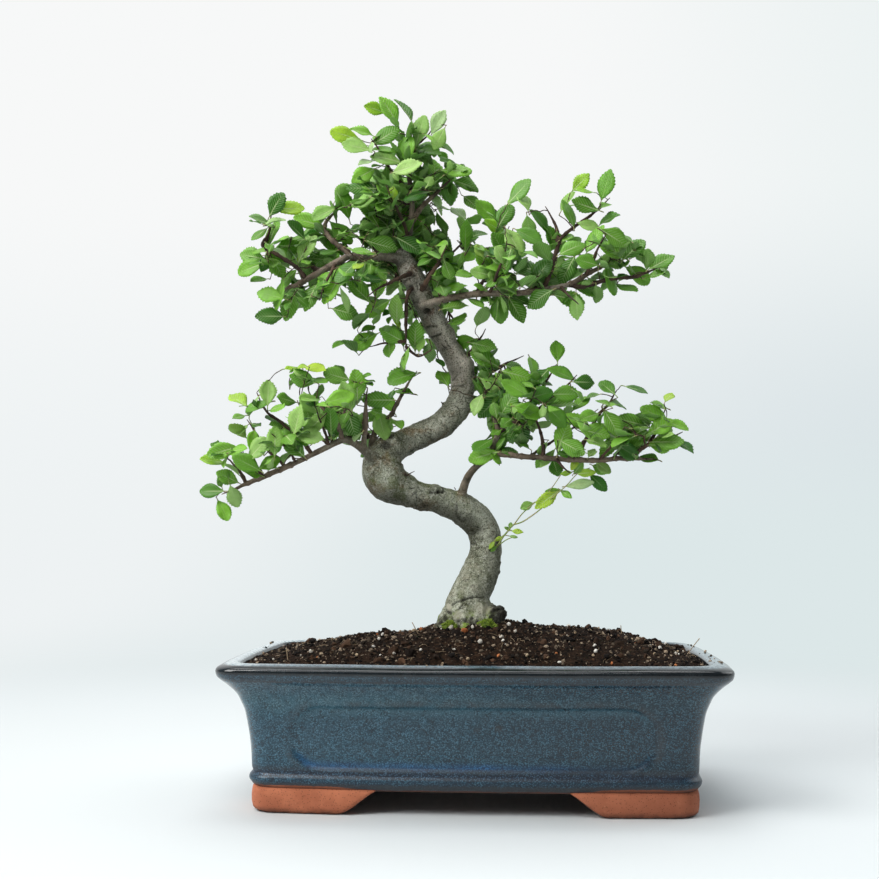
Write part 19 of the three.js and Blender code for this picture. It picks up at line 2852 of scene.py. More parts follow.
        (25.9, -13.3, 236.5, 26.8, -14.6, 237.4, 0.48, -0.74, 0.47, -0.12, 0.48, 0.87, 9.3, 4.5, 0, 2),
        (27.1, -8.4, 239.6, 26.1, -7.7, 240.2, -0.75, 0.48, 0.45, 0.01, -0.68, 0.74, 12.5, 7.2, 0, 2),
        (12.2, -7.5, 212.6, 12.9, -6.5, 213.7, 0.44, 0.6, 0.67, -0.1, -0.71, 0.7, 9.6, 4.7, 0, 2),
        (17.1, -2.5, 242.8, 18.3, -2.7, 241.9, 0.77, -0.1, -0.63, 0.54, -0.4, 0.74, 12.1, 7.4, 0, 2),
        (28, -13.6, 236.7, 29.5, -13.1, 237.3, 0.88, 0.31, 0.36, -0.28, -0.28, 0.92, 13, 7.2, 0, 2),
        (9.1, -11.3, 212.8, 8.5, -9.6, 214, -0.28, 0.77, 0.57, 0.53, -0.37, 0.77, 7.4, 4.5, 0, 2),
        (24.4, -12.6, 235.3, 24.5, -11.3, 236.5, 0.1, 0.74, 0.67, 0.18, -0.67, 0.72, 10.5, 5.7, 0, 2),
        (18.5, -11.1, 232, 17.6, -11.8, 231.4, -0.7, -0.53, -0.48, -0.04, -0.64, 0.77, 10.2, 5.5, 0, 2),
        (35.5, -17.6, 239.9, 34.7, -17.7, 238.4, -0.46, -0.07, -0.88, -0.88, -0.09, 0.47, 8.2, 4.4, 0, 2),
        (10.4, -13.1, 218.1, 9.3, -13.8, 217.6, -0.77, -0.52, -0.36, 0.06, -0.63, 0.77, 8.5, 4.5, 0, 2),
        (14.9, -4.6, 226.7, 14.1, -5, 228.1, -0.47, -0.29, 0.84, 0.71, -0.69, 0.16, 6.9, 4.2, 0, 2),
        (17.6, -16.7, 215, 15.8, -15.9, 215.2, -0.93, 0.37, 0.08, -0.2, -0.66, 0.73, 10.6, 5.9, 0, 2),
    ]),
    ("shoot_right_lower_6", [
        (51.8, -28.2, 211.6, 52.3, -28.7, 213.9, 0.27, -0.26, 0.93, -0.45, -0.88, -0.11, 21.1, 11.8, 0, 1),
        (63.7, -31, 229.6, 65.7, -31.2, 229.4, 0.96, -0.11, -0.27, 0.02, -0.9, 0.44, 21, 11.8, 0, 1),
        (79.7, -36.5, 242.6, 80.7, -36.6, 241.3, 0.5, -0.09, -0.86, 0.4, -0.86, 0.32, 20.9, 11.8, 0, 1),
        (75.4, -22.2, 228.5, 73.8, -22.7, 229.8, -0.83, -0.29, 0.47, 0.5, -0.76, 0.41, 21.3, 10.8, 0, 1),
        (52.1, -40.8, 221.7, 53.8, -41, 221.1, 0.86, -0.1, -0.5, -0.03, -0.99, 0.14, 17.9, 10.7, 0, 1),
        (79.8, -28.5, 239.2, 78.5, -29.9, 239.1, -0.69, -0.68, -0.25, 0.55, -0.72, 0.43, 17.3, 8.4, 0, 1),
        (86.4, -39.5, 241.3, 85.1, -38.3, 242.5, -0.67, 0.61, 0.42, 0.08, -0.5, 0.86, 12.9, 6.3, 0, 1),
        (68.3, -38.6, 221.9, 69.8, -39.9, 221.8, 0.74, -0.62, -0.24, -0.26, -0.6, 0.75, 15.3, 7.7, 0, 1),
        (70.7, -32, 210, 71.6, -30.6, 211.5, 0.47, 0.68, 0.57, 0.1, -0.68, 0.73, 10.4, 5.3, 0, 1),
        (81.2, -38.4, 240.1, 80.7, -36.9, 239.2, -0.24, 0.73, -0.64, -0.73, 0.3, 0.61, 10.3, 5.5, 0, 1),
        (87.6, -26, 210.4, 88.1, -27.4, 212, 0.24, -0.73, 0.64, -0.75, 0.28, 0.6, 10.3, 5.8, 0, 1),
        (61, -26.8, 212.2, 59.7, -28.2, 212.9, -0.65, -0.75, 0.13, 0.61, -0.41, 0.68, 10.4, 5.5, 0, 1),
        (68.9, -39.3, 231.8, 68.7, -41.2, 231.8, -0.09, -0.97, -0.23, 0.41, -0.25, 0.88, 15.1, 8.8, 0, 0),
        (67.1, -14.5, 234.6, 67.8, -12.6, 234.7, 0.33, 0.93, -0.15, 0.38, 0.02, 0.93, 18.4, 10.1, 0, 0),
        (80.1, -19.4, 228.2, 79.9, -21.3, 227.9, -0.07, -0.94, -0.33, 0.18, -0.34, 0.92, 17, 9.6, 0, 0),
        (71.6, -40.3, 221.8, 72.3, -42, 223, 0.35, -0.85, 0.39, -0.65, 0.08, 0.75, 14.7, 8.6, 0, 0),
        (63.1, -8.6, 213.8, 62.7, -6.6, 213.9, -0.19, 0.97, -0.13, -0.03, 0.13, 0.99, 13.6, 7.9, 0, 0),
        (90.8, -37.5, 221.4, 90.1, -35.7, 222.4, -0.36, 0.89, 0.28, -0.08, -0.32, 0.94, 18.6, 9.4, 0, 0),
        (60.4, -13.8, 218.5, 60.1, -11.8, 218.9, -0.19, 0.98, -0.01, 0.1, 0.03, 0.99, 16.1, 9.4, 0, 0),
        (65.4, -30.9, 218.6, 64.9, -32.7, 218.4, -0.24, -0.92, -0.3, -0.26, -0.23, 0.94, 12.7, 7.2, 0, 0),
        (100.3, -48.7, 223.3, 98.5, -49.4, 222.9, -0.87, -0.34, -0.37, -0.25, -0.34, 0.91, 16.9, 9.8, 0, 0),
        (88.1, -39.8, 223.2, 88.7, -41.7, 223.7, 0.28, -0.96, 0.07, 0.32, 0.16, 0.93, 17, 9.8, 3, 0),
        (52, -33, 216.5, 53.6, -34.1, 217.3, 0.76, -0.5, 0.42, 0.17, 0.77, 0.61, 7.1, 4.1, 0, 2),
        (73.9, -25.9, 230.9, 72.5, -26.1, 231.8, -0.85, -0.13, 0.5, 0.47, -0.61, 0.64, 9.2, 5.4, 1, 2),
        (62, -25.2, 212.2, 62.9, -26.5, 213.2, 0.5, -0.69, 0.52, -0.62, 0.13, 0.77, 7.3, 4.4, 0, 2),
        (71.7, -33, 231.4, 70.6, -33.1, 231.9, -0.92, -0.1, 0.38, 0.4, -0.26, 0.88, 12.7, 7.7, 0, 2),
        (76, -21.8, 228.5, 77.5, -22, 229.4, 0.83, -0.12, 0.54, -0.5, -0.56, 0.65, 7.2, 4, 0, 2),
        (67.4, -14.8, 234.5, 67.5, -13.2, 235.1, 0.1, 0.93, 0.35, 0.03, -0.35, 0.94, 8, 4.6, 0, 2),
        (61.6, -11, 216.9, 63.4, -9.7, 216.8, 0.83, 0.56, 0, 0.03, -0.03, 1, 12.3, 6.3, 3, 2),
        (85.2, -29.3, 218.5, 86.3, -28.4, 218.4, 0.79, 0.61, -0.05, -0.51, 0.71, 0.49, 7, 4, 0, 2),
        (95.2, -46.8, 227.7, 97, -47.9, 227.8, 0.84, -0.54, 0.06, -0.05, 0.03, 1, 10.1, 6.1, 1, 2),
        (62.7, -9, 217.6, 61.9, -8.6, 218.6, -0.61, 0.34, 0.72, 0.13, -0.85, 0.51, 8.5, 4.1, 0, 2),
        (74.5, -23.9, 228.5, 73.6, -22, 228.9, -0.42, 0.89, 0.17, 0.32, -0.02, 0.95, 10.3, 5.7, 1, 2),
        (79.8, -36.5, 242.5, 81.6, -36.2, 242.9, 0.96, 0.18, 0.2, -0.12, -0.36, 0.93, 9.8, 5.9, 0, 2),
        (64.3, -32.6, 217.2, 62.5, -31.7, 216.6, -0.85, 0.43, -0.3, -0.12, 0.39, 0.91, 9.8, 5.2, 0, 2),
    ]),
    ("shoot_right_mid_1", [
        (16.7, 70.2, 271.3, 17.2, 72.1, 271.9, 0.25, 0.96, 0.09, -0.18, -0.04, 0.98, 14.8, 8, 0, 0),
        (36, 59.4, 265.5, 34.8, 61, 265.7, -0.58, 0.81, -0.11, -0.81, -0.59, 0, 12.9, 7.6, 0, 0),
        (11.3, 58.5, 284.6, 10.7, 60.4, 284.7, -0.28, 0.95, -0.13, -0.08, 0.11, 0.99, 14.7, 8.8, 0, 0),
        (-2.7, 60.3, 273.2, -3.6, 62, 273, -0.45, 0.84, -0.3, 0.11, 0.38, 0.92, 18.9, 10.5, 0, 0),
        (32.7, 67.3, 280.4, 31.3, 68.6, 281, -0.72, 0.68, 0.14, 0.05, -0.14, 0.99, 14.4, 8, 0, 0),
        (5.8, 73.1, 274.6, 5.2, 75, 275.2, -0.29, 0.95, 0.09, -0.05, -0.11, 0.99, 15.7, 8.5, 0, 0),
        (14.9, 47.8, 273.1, 15.2, 49.7, 273.2, 0.15, 0.97, -0.18, 0.12, 0.16, 0.98, 15.4, 7.9, 0, 0),
        (20.7, 42, 269.3, 21.6, 43.8, 269.9, 0.45, 0.89, 0.13, -0.28, 0, 0.96, 14.9, 8.5, 0, 0),
        (6, 58.9, 277.3, 5.4, 59.9, 276, -0.28, 0.49, -0.83, -0.46, 0.69, 0.56, 12.9, 6.3, 0, 0),
        (29, 45.8, 270, 30, 47.5, 270.7, 0.51, 0.85, 0.15, -0.51, 0.15, 0.85, 14.5, 8.5, 0, 0),
        (26.5, 63.1, 266, 27, 64.6, 267.7, 0.22, 0.73, 0.65, -0.97, 0.13, 0.19, 17.6, 10.5, 3, 0),
        (19, 48.3, 268.6, 18.5, 50.2, 268.6, -0.25, 0.95, -0.18, 0.57, 0.3, 0.77, 18.6, 9.4, 0, 0),
        (26.5, 50.2, 281.5, 25.1, 50.6, 280.5, -0.7, 0.21, -0.68, -0.44, 0.63, 0.64, 18.6, 10.2, 0, 0),
        (23.4, 65.9, 280.2, 23.9, 67.8, 280.9, 0.23, 0.96, 0.14, -0.17, -0.1, 0.98, 15.7, 8.2, 0, 0),
        (39.5, 75.6, 275.7, 38.2, 76.9, 276.8, -0.67, 0.65, 0.35, 0.24, -0.26, 0.94, 12.7, 6.6, 0, 0),
        (19.1, 67.2, 280.7, 18.1, 68.6, 280.1, -0.49, 0.72, -0.49, -0.15, 0.48, 0.86, 18.7, 10.3, 0, 0),
        (18.4, 34.9, 272.1, 19.4, 36.5, 271.8, 0.51, 0.79, -0.34, 0.3, 0.2, 0.93, 16.4, 8.2, 0, 0),
        (5.5, 49.2, 286.3, 5.1, 51.1, 286.8, -0.2, 0.98, 0.06, 0.15, -0.03, 0.99, 14.1, 8.2, 0, 0),
        (-2.9, 54.4, 300.3, -2.7, 56.4, 300.5, 0.1, 0.99, -0.08, 0.1, 0.07, 0.99, 12.6, 6.3, 3, 0),
        (7, 51.9, 257.2, 8.9, 52.4, 258.1, 0.93, 0.27, 0.23, -0.28, 0.19, 0.94, 12.7, 6.7, 0, 0),
        (11.3, 51.4, 292.8, 10.8, 53.3, 293.6, -0.24, 0.95, 0.21, 0.18, -0.17, 0.97, 13.8, 7.4, 0, 0),
        (9.3, 60, 269.9, 9.5, 62, 269.9, 0.08, 0.98, -0.21, -0.24, 0.22, 0.95, 19, 10.3, 0, 0),
        (7, 57.6, 288.3, 7.8, 59.3, 288, 0.39, 0.87, -0.32, 0.02, 0.34, 0.94, 13.6, 8, 0, 0),
        (10.8, 75.5, 264.5, 12.1, 74.2, 265.7, 0.62, -0.66, 0.43, -0.54, 0.04, 0.84, 18.2, 9.4, 0, 0),
        (-0.8, 47.9, 273.4, 0.5, 49.4, 273.8, 0.67, 0.74, 0, 0, 0, 1, 19.3, 10.7, 0, 0),
        (13.1, 41.4, 284.3, 11.8, 42.9, 285, -0.68, 0.72, 0.16, 0.06, -0.16, 0.99, 19.3, 10.4, 3, 0),
        (4.2, 54.2, 273.8, 4, 56.2, 274.1, -0.12, 0.99, -0.07, -0.06, 0.06, 1, 17.6, 8.5, 0, 0),
        (21.1, 68.9, 271, 21.7, 70.8, 271.5, 0.3, 0.95, 0.03, 0.13, -0.07, 0.99, 13.4, 7.1, 0, 0),
        (22.3, 67.8, 269.6, 23.5, 67.3, 269.8, 0.9, -0.38, 0.22, -0.28, -0.13, 0.95, 6.9, 3.8, 3, 2),
        (15.1, 71.7, 269.5, 15.4, 72.9, 268.2, 0.18, 0.68, -0.71, 0.84, 0.28, 0.47, 7.3, 3.5, 0, 2),
        (20.6, 41.8, 269.4, 21.9, 41.7, 269.4, 1, -0.07, 0.06, -0.08, -0.27, 0.96, 9.5, 5, 0, 2),
        (7.2, 57.6, 288.1, 7.2, 57.8, 289.5, 0, 0.09, 1, -0.44, -0.89, 0.08, 10.9, 5.9, 0, 2),
        (7.8, 54.6, 276.6, 6.7, 56.1, 275.9, -0.55, 0.76, -0.35, -0.65, -0.12, 0.75, 8.2, 4.1, 0, 2),
        (17.1, 69.9, 271.8, 15.7, 70.1, 272.1, -0.97, 0.15, 0.2, 0.12, -0.41, 0.9, 11.6, 6.1, 0, 2),
        (29.1, 48.7, 276.4, 28.2, 49.6, 277.1, -0.6, 0.61, 0.51, -0.25, -0.76, 0.61, 12.4, 7.1, 0, 2),
        (28.8, 47.7, 273.6, 27.1, 48.8, 273.5, -0.84, 0.54, -0.07, -0.23, -0.23, 0.95, 7.5, 3.8, 0, 2),
        (20.8, 66.6, 280.5, 22.3, 67.5, 280.6, 0.86, 0.52, 0.04, 0.05, -0.17, 0.98, 8.7, 5.3, 0, 2),
        (18.6, 35.5, 271.9, 19.9, 35.4, 272.8, 0.83, -0.03, 0.55, -0.02, 1, 0.08, 8.9, 5, 0, 2),
        (6.4, 58.3, 277.5, 6, 58.9, 278.7, -0.3, 0.42, 0.86, -0.19, -0.91, 0.37, 12.5, 6.9, 0, 2),
        (4.3, 53.9, 274, 5.4, 55.1, 273.4, 0.64, 0.71, -0.31, -0.05, 0.44, 0.9, 12.5, 6.2, 3, 2),
        (5, 65.4, 276.3, 6.5, 65.6, 276.1, 0.99, 0.1, -0.13, 0.16, -0.51, 0.85, 12.5, 6.5, 0, 2),
        (20.4, 43, 269.1, 20.4, 44.3, 267.6, -0.01, 0.64, -0.76, -0.5, 0.66, 0.56, 11.2, 6.9, 3, 2),
        (10.2, 49.2, 254.5, 10.5, 50.6, 254.4, 0.18, 0.98, -0.05, -0.41, 0.12, 0.9, 9.8, 5, 3, 2),
        (3.6, 49.8, 275, 3.8, 50.8, 275.8, 0.13, 0.78, 0.62, -0.45, -0.51, 0.73, 9.8, 4.8, 0, 2),
        (20.9, 68.7, 272, 19.4, 68.8, 270.4, -0.66, 0.03, -0.75, -0.75, -0.01, 0.66, 10.6, 5.8, 0, 2),
        (16.2, 54.2, 251.8, 17.4, 54.6, 252.6, 0.79, 0.26, 0.55, 0.6, -0.46, -0.65, 9.5, 5.4, 0, 2),
        (30.1, 60.6, 265.8, 30.6, 59.5, 266.6, 0.36, -0.74, 0.57, -0.33, 0.47, 0.82, 6.6, 3.5, 0, 2),
        (5.7, 50.8, 282.6, 5.2, 52, 284.1, -0.28, 0.61, 0.74, 0.08, -0.76, 0.65, 9, 5.2, 3, 2),
        (25.7, 44.5, 269.2, 26.9, 44.2, 269, 0.94, -0.24, -0.24, 0, -0.72, 0.69, 12.2, 6.5, 0, 2),
        (18.7, 66.4, 282.1, 18.7, 68.3, 281.4, 0.03, 0.94, -0.34, -0.7, 0.27, 0.67, 9.9, 5.9, 0, 2),
        (19.7, 67.8, 276.5, 18.6, 68.9, 276.4, -0.71, 0.7, -0.09, -0.01, 0.11, 0.99, 12.8, 6.7, 0, 2),
        (23.2, 67, 268.5, 24.7, 67.3, 268.4, 0.97, 0.23, -0.04, 0.21, -0.78, 0.59, 11.6, 6, 0, 2),
        (15.3, 71.5, 269.7, 13.9, 70.8, 269.1, -0.84, -0.43, -0.33, -0.07, -0.51, 0.86, 12.7, 7, 0, 2),
        (20.7, 41.8, 269.4, 21.5, 41.6, 268.5, 0.68, -0.15, -0.71, 0.53, -0.57, 0.63, 12.1, 7.3, 0, 2),
        (9.4, 58.1, 286.2, 8.7, 58.9, 287.3, -0.46, 0.52, 0.72, 0.52, -0.51, 0.69, 8.1, 4.1, 0, 2),
        (19.9, 68, 275.3, 19.4, 69.9, 275.1, -0.25, 0.97, -0.09, -0.16, 0.05, 0.99, 10.1, 5.2, 0, 2),
        (19.3, 67.1, 280.6, 20, 65.9, 281.1, 0.49, -0.82, 0.3, -0.65, -0.11, 0.76, 7.7, 4.1, 0, 2),
    ]),
    ("shoot_right_mid_2", [
        (0.4, 43.3, 263.2, 0.9, 45.1, 264.2, 0.24, 0.91, 0.33, -0.19, -0.29, 0.94, 15.7, 9.1, 0, 0),
        (-2.8, 54.4, 273.5, -3.7, 56.1, 274.3, -0.49, 0.85, 0.21, 0.24, -0.1, 0.97, 13.2, 7.3, 0, 0),
        (-13, 26.4, 276.8, -12.1, 27.9, 276.2, 0.45, 0.74, -0.49, 0.42, 0.31, 0.85, 15.5, 8.8, 0, 0),
        (3, 37, 274.2, 1.8, 37.1, 273, -0.56, 0.05, -0.82, -0.56, 0.72, 0.42, 12.7, 7.1, 3, 0),
        (-6.9, 25.6, 286.7, -7.3, 27.5, 287.5, -0.2, 0.97, 0.16, 0.88, 0.11, 0.46, 17.9, 9.2, 0, 0),
        (15.4, 48.9, 252.1, 15, 47.7, 254.1, -0.19, -0.58, 0.79, 0.28, 0.74, 0.61, 12.9, 7.6, 0, 0),
        (2.3, 36.5, 268.4, 2, 38.5, 268.5, -0.13, 0.98, -0.16, -0.37, 0.1, 0.92, 17.4, 8.6, 0, 0),
        (11.6, 39.6, 268.3, 11.9, 41.6, 268.8, 0.12, 0.99, 0.02, -0.21, 0, 0.98, 13.5, 7.9, 3, 0),
        (-15.6, 34.7, 277, -15.9, 36.6, 277.9, -0.19, 0.95, 0.26, -0.32, -0.31, 0.89, 14.9, 7.3, 0, 0),
        (-22.3, 44.3, 276.8, -21.3, 46, 276.8, 0.51, 0.84, -0.19, -0.55, 0.49, 0.68, 17.6, 9.9, 0, 0),
        (-3.7, 40.4, 271.5, -4.4, 41.8, 270.6, -0.33, 0.7, -0.64, 0.28, 0.72, 0.64, 15.6, 9.1, 0, 0),
        (-6.1, 53.1, 268.2, -5.9, 54.7, 269.8, 0.09, 0.8, 0.6, 0.82, 0.28, -0.49, 12.5, 6.6, 0, 0),
        (3.2, 40.1, 253.4, 3.9, 41.9, 253.8, 0.33, 0.94, 0, 0.93, -0.33, 0.14, 15.8, 8.5, 0, 0),
        (-10.4, 31.3, 249.5, -9.2, 32.8, 250.2, 0.61, 0.77, 0.17, -0.59, 0.31, 0.75, 18.5, 10.7, 3, 0),
        (-19.6, 36.4, 277.3, -18.2, 37.7, 277.4, 0.72, 0.67, -0.16, 0.35, -0.16, 0.93, 17.3, 9.4, 0, 0),
        (0.6, 27.8, 272.4, 1.9, 29.1, 271.9, 0.63, 0.66, -0.42, 0.12, 0.45, 0.89, 12.7, 6.2, 0, 0),
        (2.4, 34.7, 277.5, 3.5, 36.4, 278.2, 0.51, 0.84, 0.17, -0.39, 0.06, 0.92, 17.7, 8.8, 0, 0),
        (-10.5, 40.2, 269.3, -10.6, 42.2, 270.1, -0.03, 0.98, 0.22, 0.5, -0.17, 0.85, 13.5, 7.9, 0, 0),
        (-16.4, 28.9, 268.8, -16, 30.8, 269.9, 0.16, 0.93, 0.32, -0.58, -0.18, 0.8, 14.1, 7.2, 0, 0),
        (-2.2, 28.1, 283.2, -4.1, 28.2, 284.3, -0.94, 0.07, 0.33, 0.21, 0.89, 0.42, 14.7, 8.2, 0, 0),
        (-11, 26.6, 269.4, -12.7, 27.7, 269.6, -0.85, 0.53, -0.09, 0.15, 0.4, 0.9, 16, 8.8, 0, 0),
        (17.1, 56.1, 251, 16.4, 54.3, 251.7, -0.35, -0.92, 0.16, -0.05, 0.19, 0.98, 16.5, 9.5, 0, 0),
        (-12.1, 33, 261.2, -11.4, 34.8, 261.2, 0.38, 0.9, -0.19, -0.21, 0.28, 0.94, 13.6, 8, 0, 0),
        (-7.7, 25.7, 274.8, -8.4, 27.6, 274.9, -0.35, 0.93, -0.14, 0.12, 0.19, 0.97, 13.5, 7.2, 0, 0),
        (-2.7, 24.8, 274.1, -3.2, 26.7, 274.9, -0.28, 0.94, 0.2, 0.71, 0.06, 0.7, 15.9, 9.4, 0, 0),
        (-19.6, 38.8, 265.6, -18.4, 40.3, 266.1, 0.64, 0.77, 0.06, -0.18, 0.07, 0.98, 13.1, 7.7, 0, 0),
        (0, 38.9, 280.1, 0.2, 40.9, 280.6, 0.09, 0.99, 0.07, -0.14, -0.06, 0.99, 16.1, 9.1, 0, 0),
        (-10.4, 35.5, 266.1, -9.7, 37, 267.7, 0.34, 0.72, 0.61, -0.86, 0.5, -0.11, 19.4, 10, 0, 0),
        (-20.4, 46.1, 258.7, -19.7, 48, 259, 0.33, 0.94, -0.08, -0.26, 0.17, 0.95, 13.8, 7.5, 0, 0),
        (2.9, 19.8, 278.1, 3.4, 21.5, 277.6, 0.26, 0.85, -0.46, 0.27, 0.4, 0.88, 14.8, 8.6, 0, 0),
        (7.8, 38, 257.1, 7.6, 39.9, 257.1, -0.1, 0.97, -0.23, -0.1, 0.22, 0.97, 19, 10.6, 3, 0),
        (15.9, 32.8, 272.1, 15.8, 34.8, 272.7, -0.03, 1, 0.05, -0.01, -0.05, 1, 13.5, 6.7, 0, 0),
        (-10.2, 26.4, 258.8, -10.6, 28.4, 259.2, -0.19, 0.98, 0.03, -0.37, -0.11, 0.92, 15.3, 8.8, 0, 0),
        (11.4, 22.2, 265.3, 12.8, 23.6, 265.7, 0.72, 0.7, 0.03, -0.37, 0.34, 0.86, 14.8, 8.6, 0, 0),
        (-14, 47.5, 258.8, -12.5, 48.8, 258.8, 0.76, 0.62, -0.17, -0.14, 0.42, 0.9, 19.3, 10.5, 0, 0),
        (-2.4, 25.8, 269.8, -1.4, 27.5, 270.2, 0.5, 0.87, -0.02, -0.25, 0.16, 0.95, 15.8, 8.3, 0, 0),
        (8.2, 47.1, 279, 9.4, 47.7, 280, 0.71, 0.35, 0.6, -0.68, 0.15, 0.72, 7.4, 3.7, 0, 2),
        (-1.1, 37.1, 268.5, 0, 35.5, 268.2, 0.54, -0.82, -0.2, 0.74, 0.35, 0.58, 12, 6.9, 0, 2),
        (-22.4, 44.1, 277, -22.9, 45.8, 276.3, -0.25, 0.9, -0.35, -0.29, 0.28, 0.92, 11.1, 6, 0, 2),
        (-0.6, 41.4, 265.4, 0.6, 41.4, 264.2, 0.71, -0.02, -0.71, 0.37, -0.84, 0.4, 8.4, 5, 0, 2),
        (1.1, 37, 278.9, 2.4, 38.4, 278.8, 0.66, 0.75, -0.05, -0.15, 0.19, 0.97, 8.8, 5.2, 0, 2),
        (3.4, 40.2, 258.7, 3.6, 38.7, 258.3, 0.12, -0.95, -0.28, -0.12, -0.3, 0.95, 12.2, 5.9, 0, 2),
        (3, 36.9, 274.4, 3.9, 36.8, 275.8, 0.57, -0.06, 0.82, -0.79, -0.31, 0.53, 7.4, 4.2, 0, 2),
        (9, 38.3, 268.2, 10.2, 37.4, 268.9, 0.7, -0.55, 0.46, -0.63, -0.16, 0.76, 7.2, 3.7, 1, 2),
        (2.7, 40.4, 256.4, 1.4, 41.2, 254.9, -0.6, 0.37, -0.71, -0.72, -0.64, 0.28, 7.4, 4.4, 0, 2),
        (0.2, 42.2, 271.7, 0.7, 40.5, 270.8, 0.28, -0.83, -0.48, 0.45, -0.33, 0.83, 6.9, 3.6, 0, 2),
        (4, 45.4, 257.8, 3.2, 47.3, 258.5, -0.4, 0.87, 0.3, -0.02, -0.34, 0.94, 8.1, 4.1, 0, 2),
        (10.8, 21.8, 265.6, 10.3, 23.7, 265.2, -0.25, 0.95, -0.2, 0.23, 0.26, 0.94, 11.5, 6.5, 0, 2),
        (16.5, 33.3, 272.1, 17.7, 32.8, 273.1, 0.73, -0.31, 0.61, -0.64, -0.62, 0.45, 10.9, 6.3, 0, 2),
        (8.6, 48.8, 255.1, 10, 47.5, 254.9, 0.71, -0.7, -0.1, -0.02, -0.16, 0.99, 6.5, 4, 0, 2),
        (13.9, 45.8, 272, 13.9, 46.8, 271.1, -0.01, 0.76, -0.65, -0.66, 0.48, 0.57, 11.6, 6.3, 0, 2),
        (6, 51.7, 279.9, 6.7, 50.3, 280.3, 0.45, -0.86, 0.24, -0.75, -0.22, 0.62, 11.6, 6.6, 3, 2),
        (12.4, 42.3, 269.9, 13.5, 42.4, 271, 0.71, 0.05, 0.7, -0.7, 0.04, 0.71, 10.8, 5.8, 3, 2),
        (-21.1, 42.6, 271.5, -21.8, 40.7, 272.3, -0.3, -0.87, 0.38, 0.41, 0.25, 0.88, 11, 6.1, 0, 2),
        (12.5, 36.2, 270.1, 13.4, 36.8, 270.4, 0.78, 0.54, 0.32, -0.1, -0.4, 0.91, 7.3, 4.3, 0, 2),
        (7.2, 37.7, 268.2, 7.8, 39, 268.1, 0.43, 0.9, -0.07, -0.08, 0.12, 0.99, 11.9, 6.8, 0, 2),
        (14, 49.2, 252.8, 15.1, 50.3, 251.5, 0.53, 0.55, -0.65, 0.33, 0.57, 0.75, 9.3, 5.6, 0, 2),
        (0.8, 32.4, 279, 1.4, 31.2, 280, 0.33, -0.73, 0.6, 0.05, 0.65, 0.76, 12.7, 7.6, 0, 2),
        (9.1, 46.1, 280.2, 9.4, 44.2, 281.1, 0.11, -0.9, 0.42, 0.62, 0.39, 0.68, 9.1, 4.7, 0, 2),
        (-0.9, 37.1, 268.5, 0.4, 38.4, 269.3, 0.66, 0.65, 0.38, -0.31, -0.22, 0.92, 12.9, 7.1, 0, 2),
        (15.3, 52.5, 252.5, 15.1, 53.4, 251.5, -0.17, 0.62, -0.77, -0.83, -0.52, -0.23, 10.5, 6, 3, 2),
        (4.2, 39.8, 258.4, 4.4, 38.8, 259.1, 0.11, -0.81, 0.58, -0.99, -0.04, 0.13, 11, 5.6, 0, 2),
        (2.8, 36.4, 275.1, 4.4, 35.5, 275.6, 0.85, -0.45, 0.29, -0.26, 0.13, 0.96, 11, 6.2, 0, 2),
    ]),
    ("shoot_right_upper_1", [
        (16.1, 9.6, 370.6, 14.7, 9, 372.3, -0.68, -0.3, 0.67, 0.41, -0.91, 0.01, 22.6, 11.6, 0, 1),
        (13.7, -11.2, 361.2, 14.6, -10.9, 363.4, 0.48, 0.16, 0.86, 0.04, -0.99, 0.16, 22.1, 11, 0, 1),
        (-4.4, -8, 357.4, -3.1, -6.7, 358.7, 0.63, 0.64, 0.44, 0.14, -0.65, 0.75, 18, 9.1, 0, 1),
        (-9.8, 17.7, 394.5, -8.6, 16.7, 393.7, 0.61, -0.5, -0.62, -0.15, -0.83, 0.53, 17.6, 8.9, 0, 1),
        (-8.2, 1.4, 366.9, -6.8, 0.2, 367.9, 0.71, -0.61, 0.33, -0.15, 0.33, 0.93, 15.3, 9, 3, 1),
        (21.5, -1.8, 360.5, 20, -2.9, 361.7, -0.75, -0.52, 0.41, 0.6, -0.79, 0.11, 17.9, 8.9, 1, 1),
        (-13.1, 20.5, 363.9, -11.8, 21.9, 363.6, 0.63, 0.7, -0.34, 0.1, 0.36, 0.93, 18.6, 10.6, 0, 1),
        (13.3, 1.5, 340.1, 12.8, 2.7, 342.1, -0.23, 0.61, 0.76, 0.27, -0.71, 0.65, 16.5, 7.9, 0, 1),
        (-7.9, -1.1, 360.4, -8.1, -2.6, 362.1, -0.14, -0.76, 0.64, 0.6, 0.45, 0.66, 13.7, 7.8, 0, 1),
        (22.1, 13.2, 367.6, 21.1, 14.6, 367.1, -0.49, 0.74, -0.47, 0.36, 0.66, 0.66, 13.5, 7.2, 0, 0),
        (17.5, 6, 349, 17.8, 7.8, 348.4, 0.11, 0.87, -0.47, 0.19, 0.45, 0.87, 13.9, 7.5, 3, 0),
        (12.7, 9.9, 382.2, 12.6, 11.9, 382.2, -0.03, 0.98, -0.18, 0.17, 0.18, 0.97, 18.6, 10.1, 0, 0),
        (23.1, 8.9, 355.5, 23.1, 10.8, 356.4, -0.03, 0.97, 0.25, 0.02, -0.25, 0.97, 16.3, 8, 0, 0),
        (16.6, 21.6, 361.4, 16.3, 23.6, 362.1, -0.14, 0.98, 0.14, -0.38, -0.18, 0.91, 14.5, 7.7, 3, 0),
        (18.1, 1.4, 363.7, 17.8, -0.5, 363.5, -0.16, -0.94, -0.3, -0.38, -0.22, 0.9, 12.8, 7.2, 0, 0),
        (-9, 15.6, 369.1, -8, 17.3, 369.2, 0.5, 0.85, -0.13, -0.12, 0.21, 0.97, 14.1, 7.3, 0, 0),
        (8.3, 10.6, 340.7, 8.4, 12.4, 342, 0.05, 0.89, 0.45, 0.17, -0.45, 0.88, 18.2, 9.4, 0, 0),
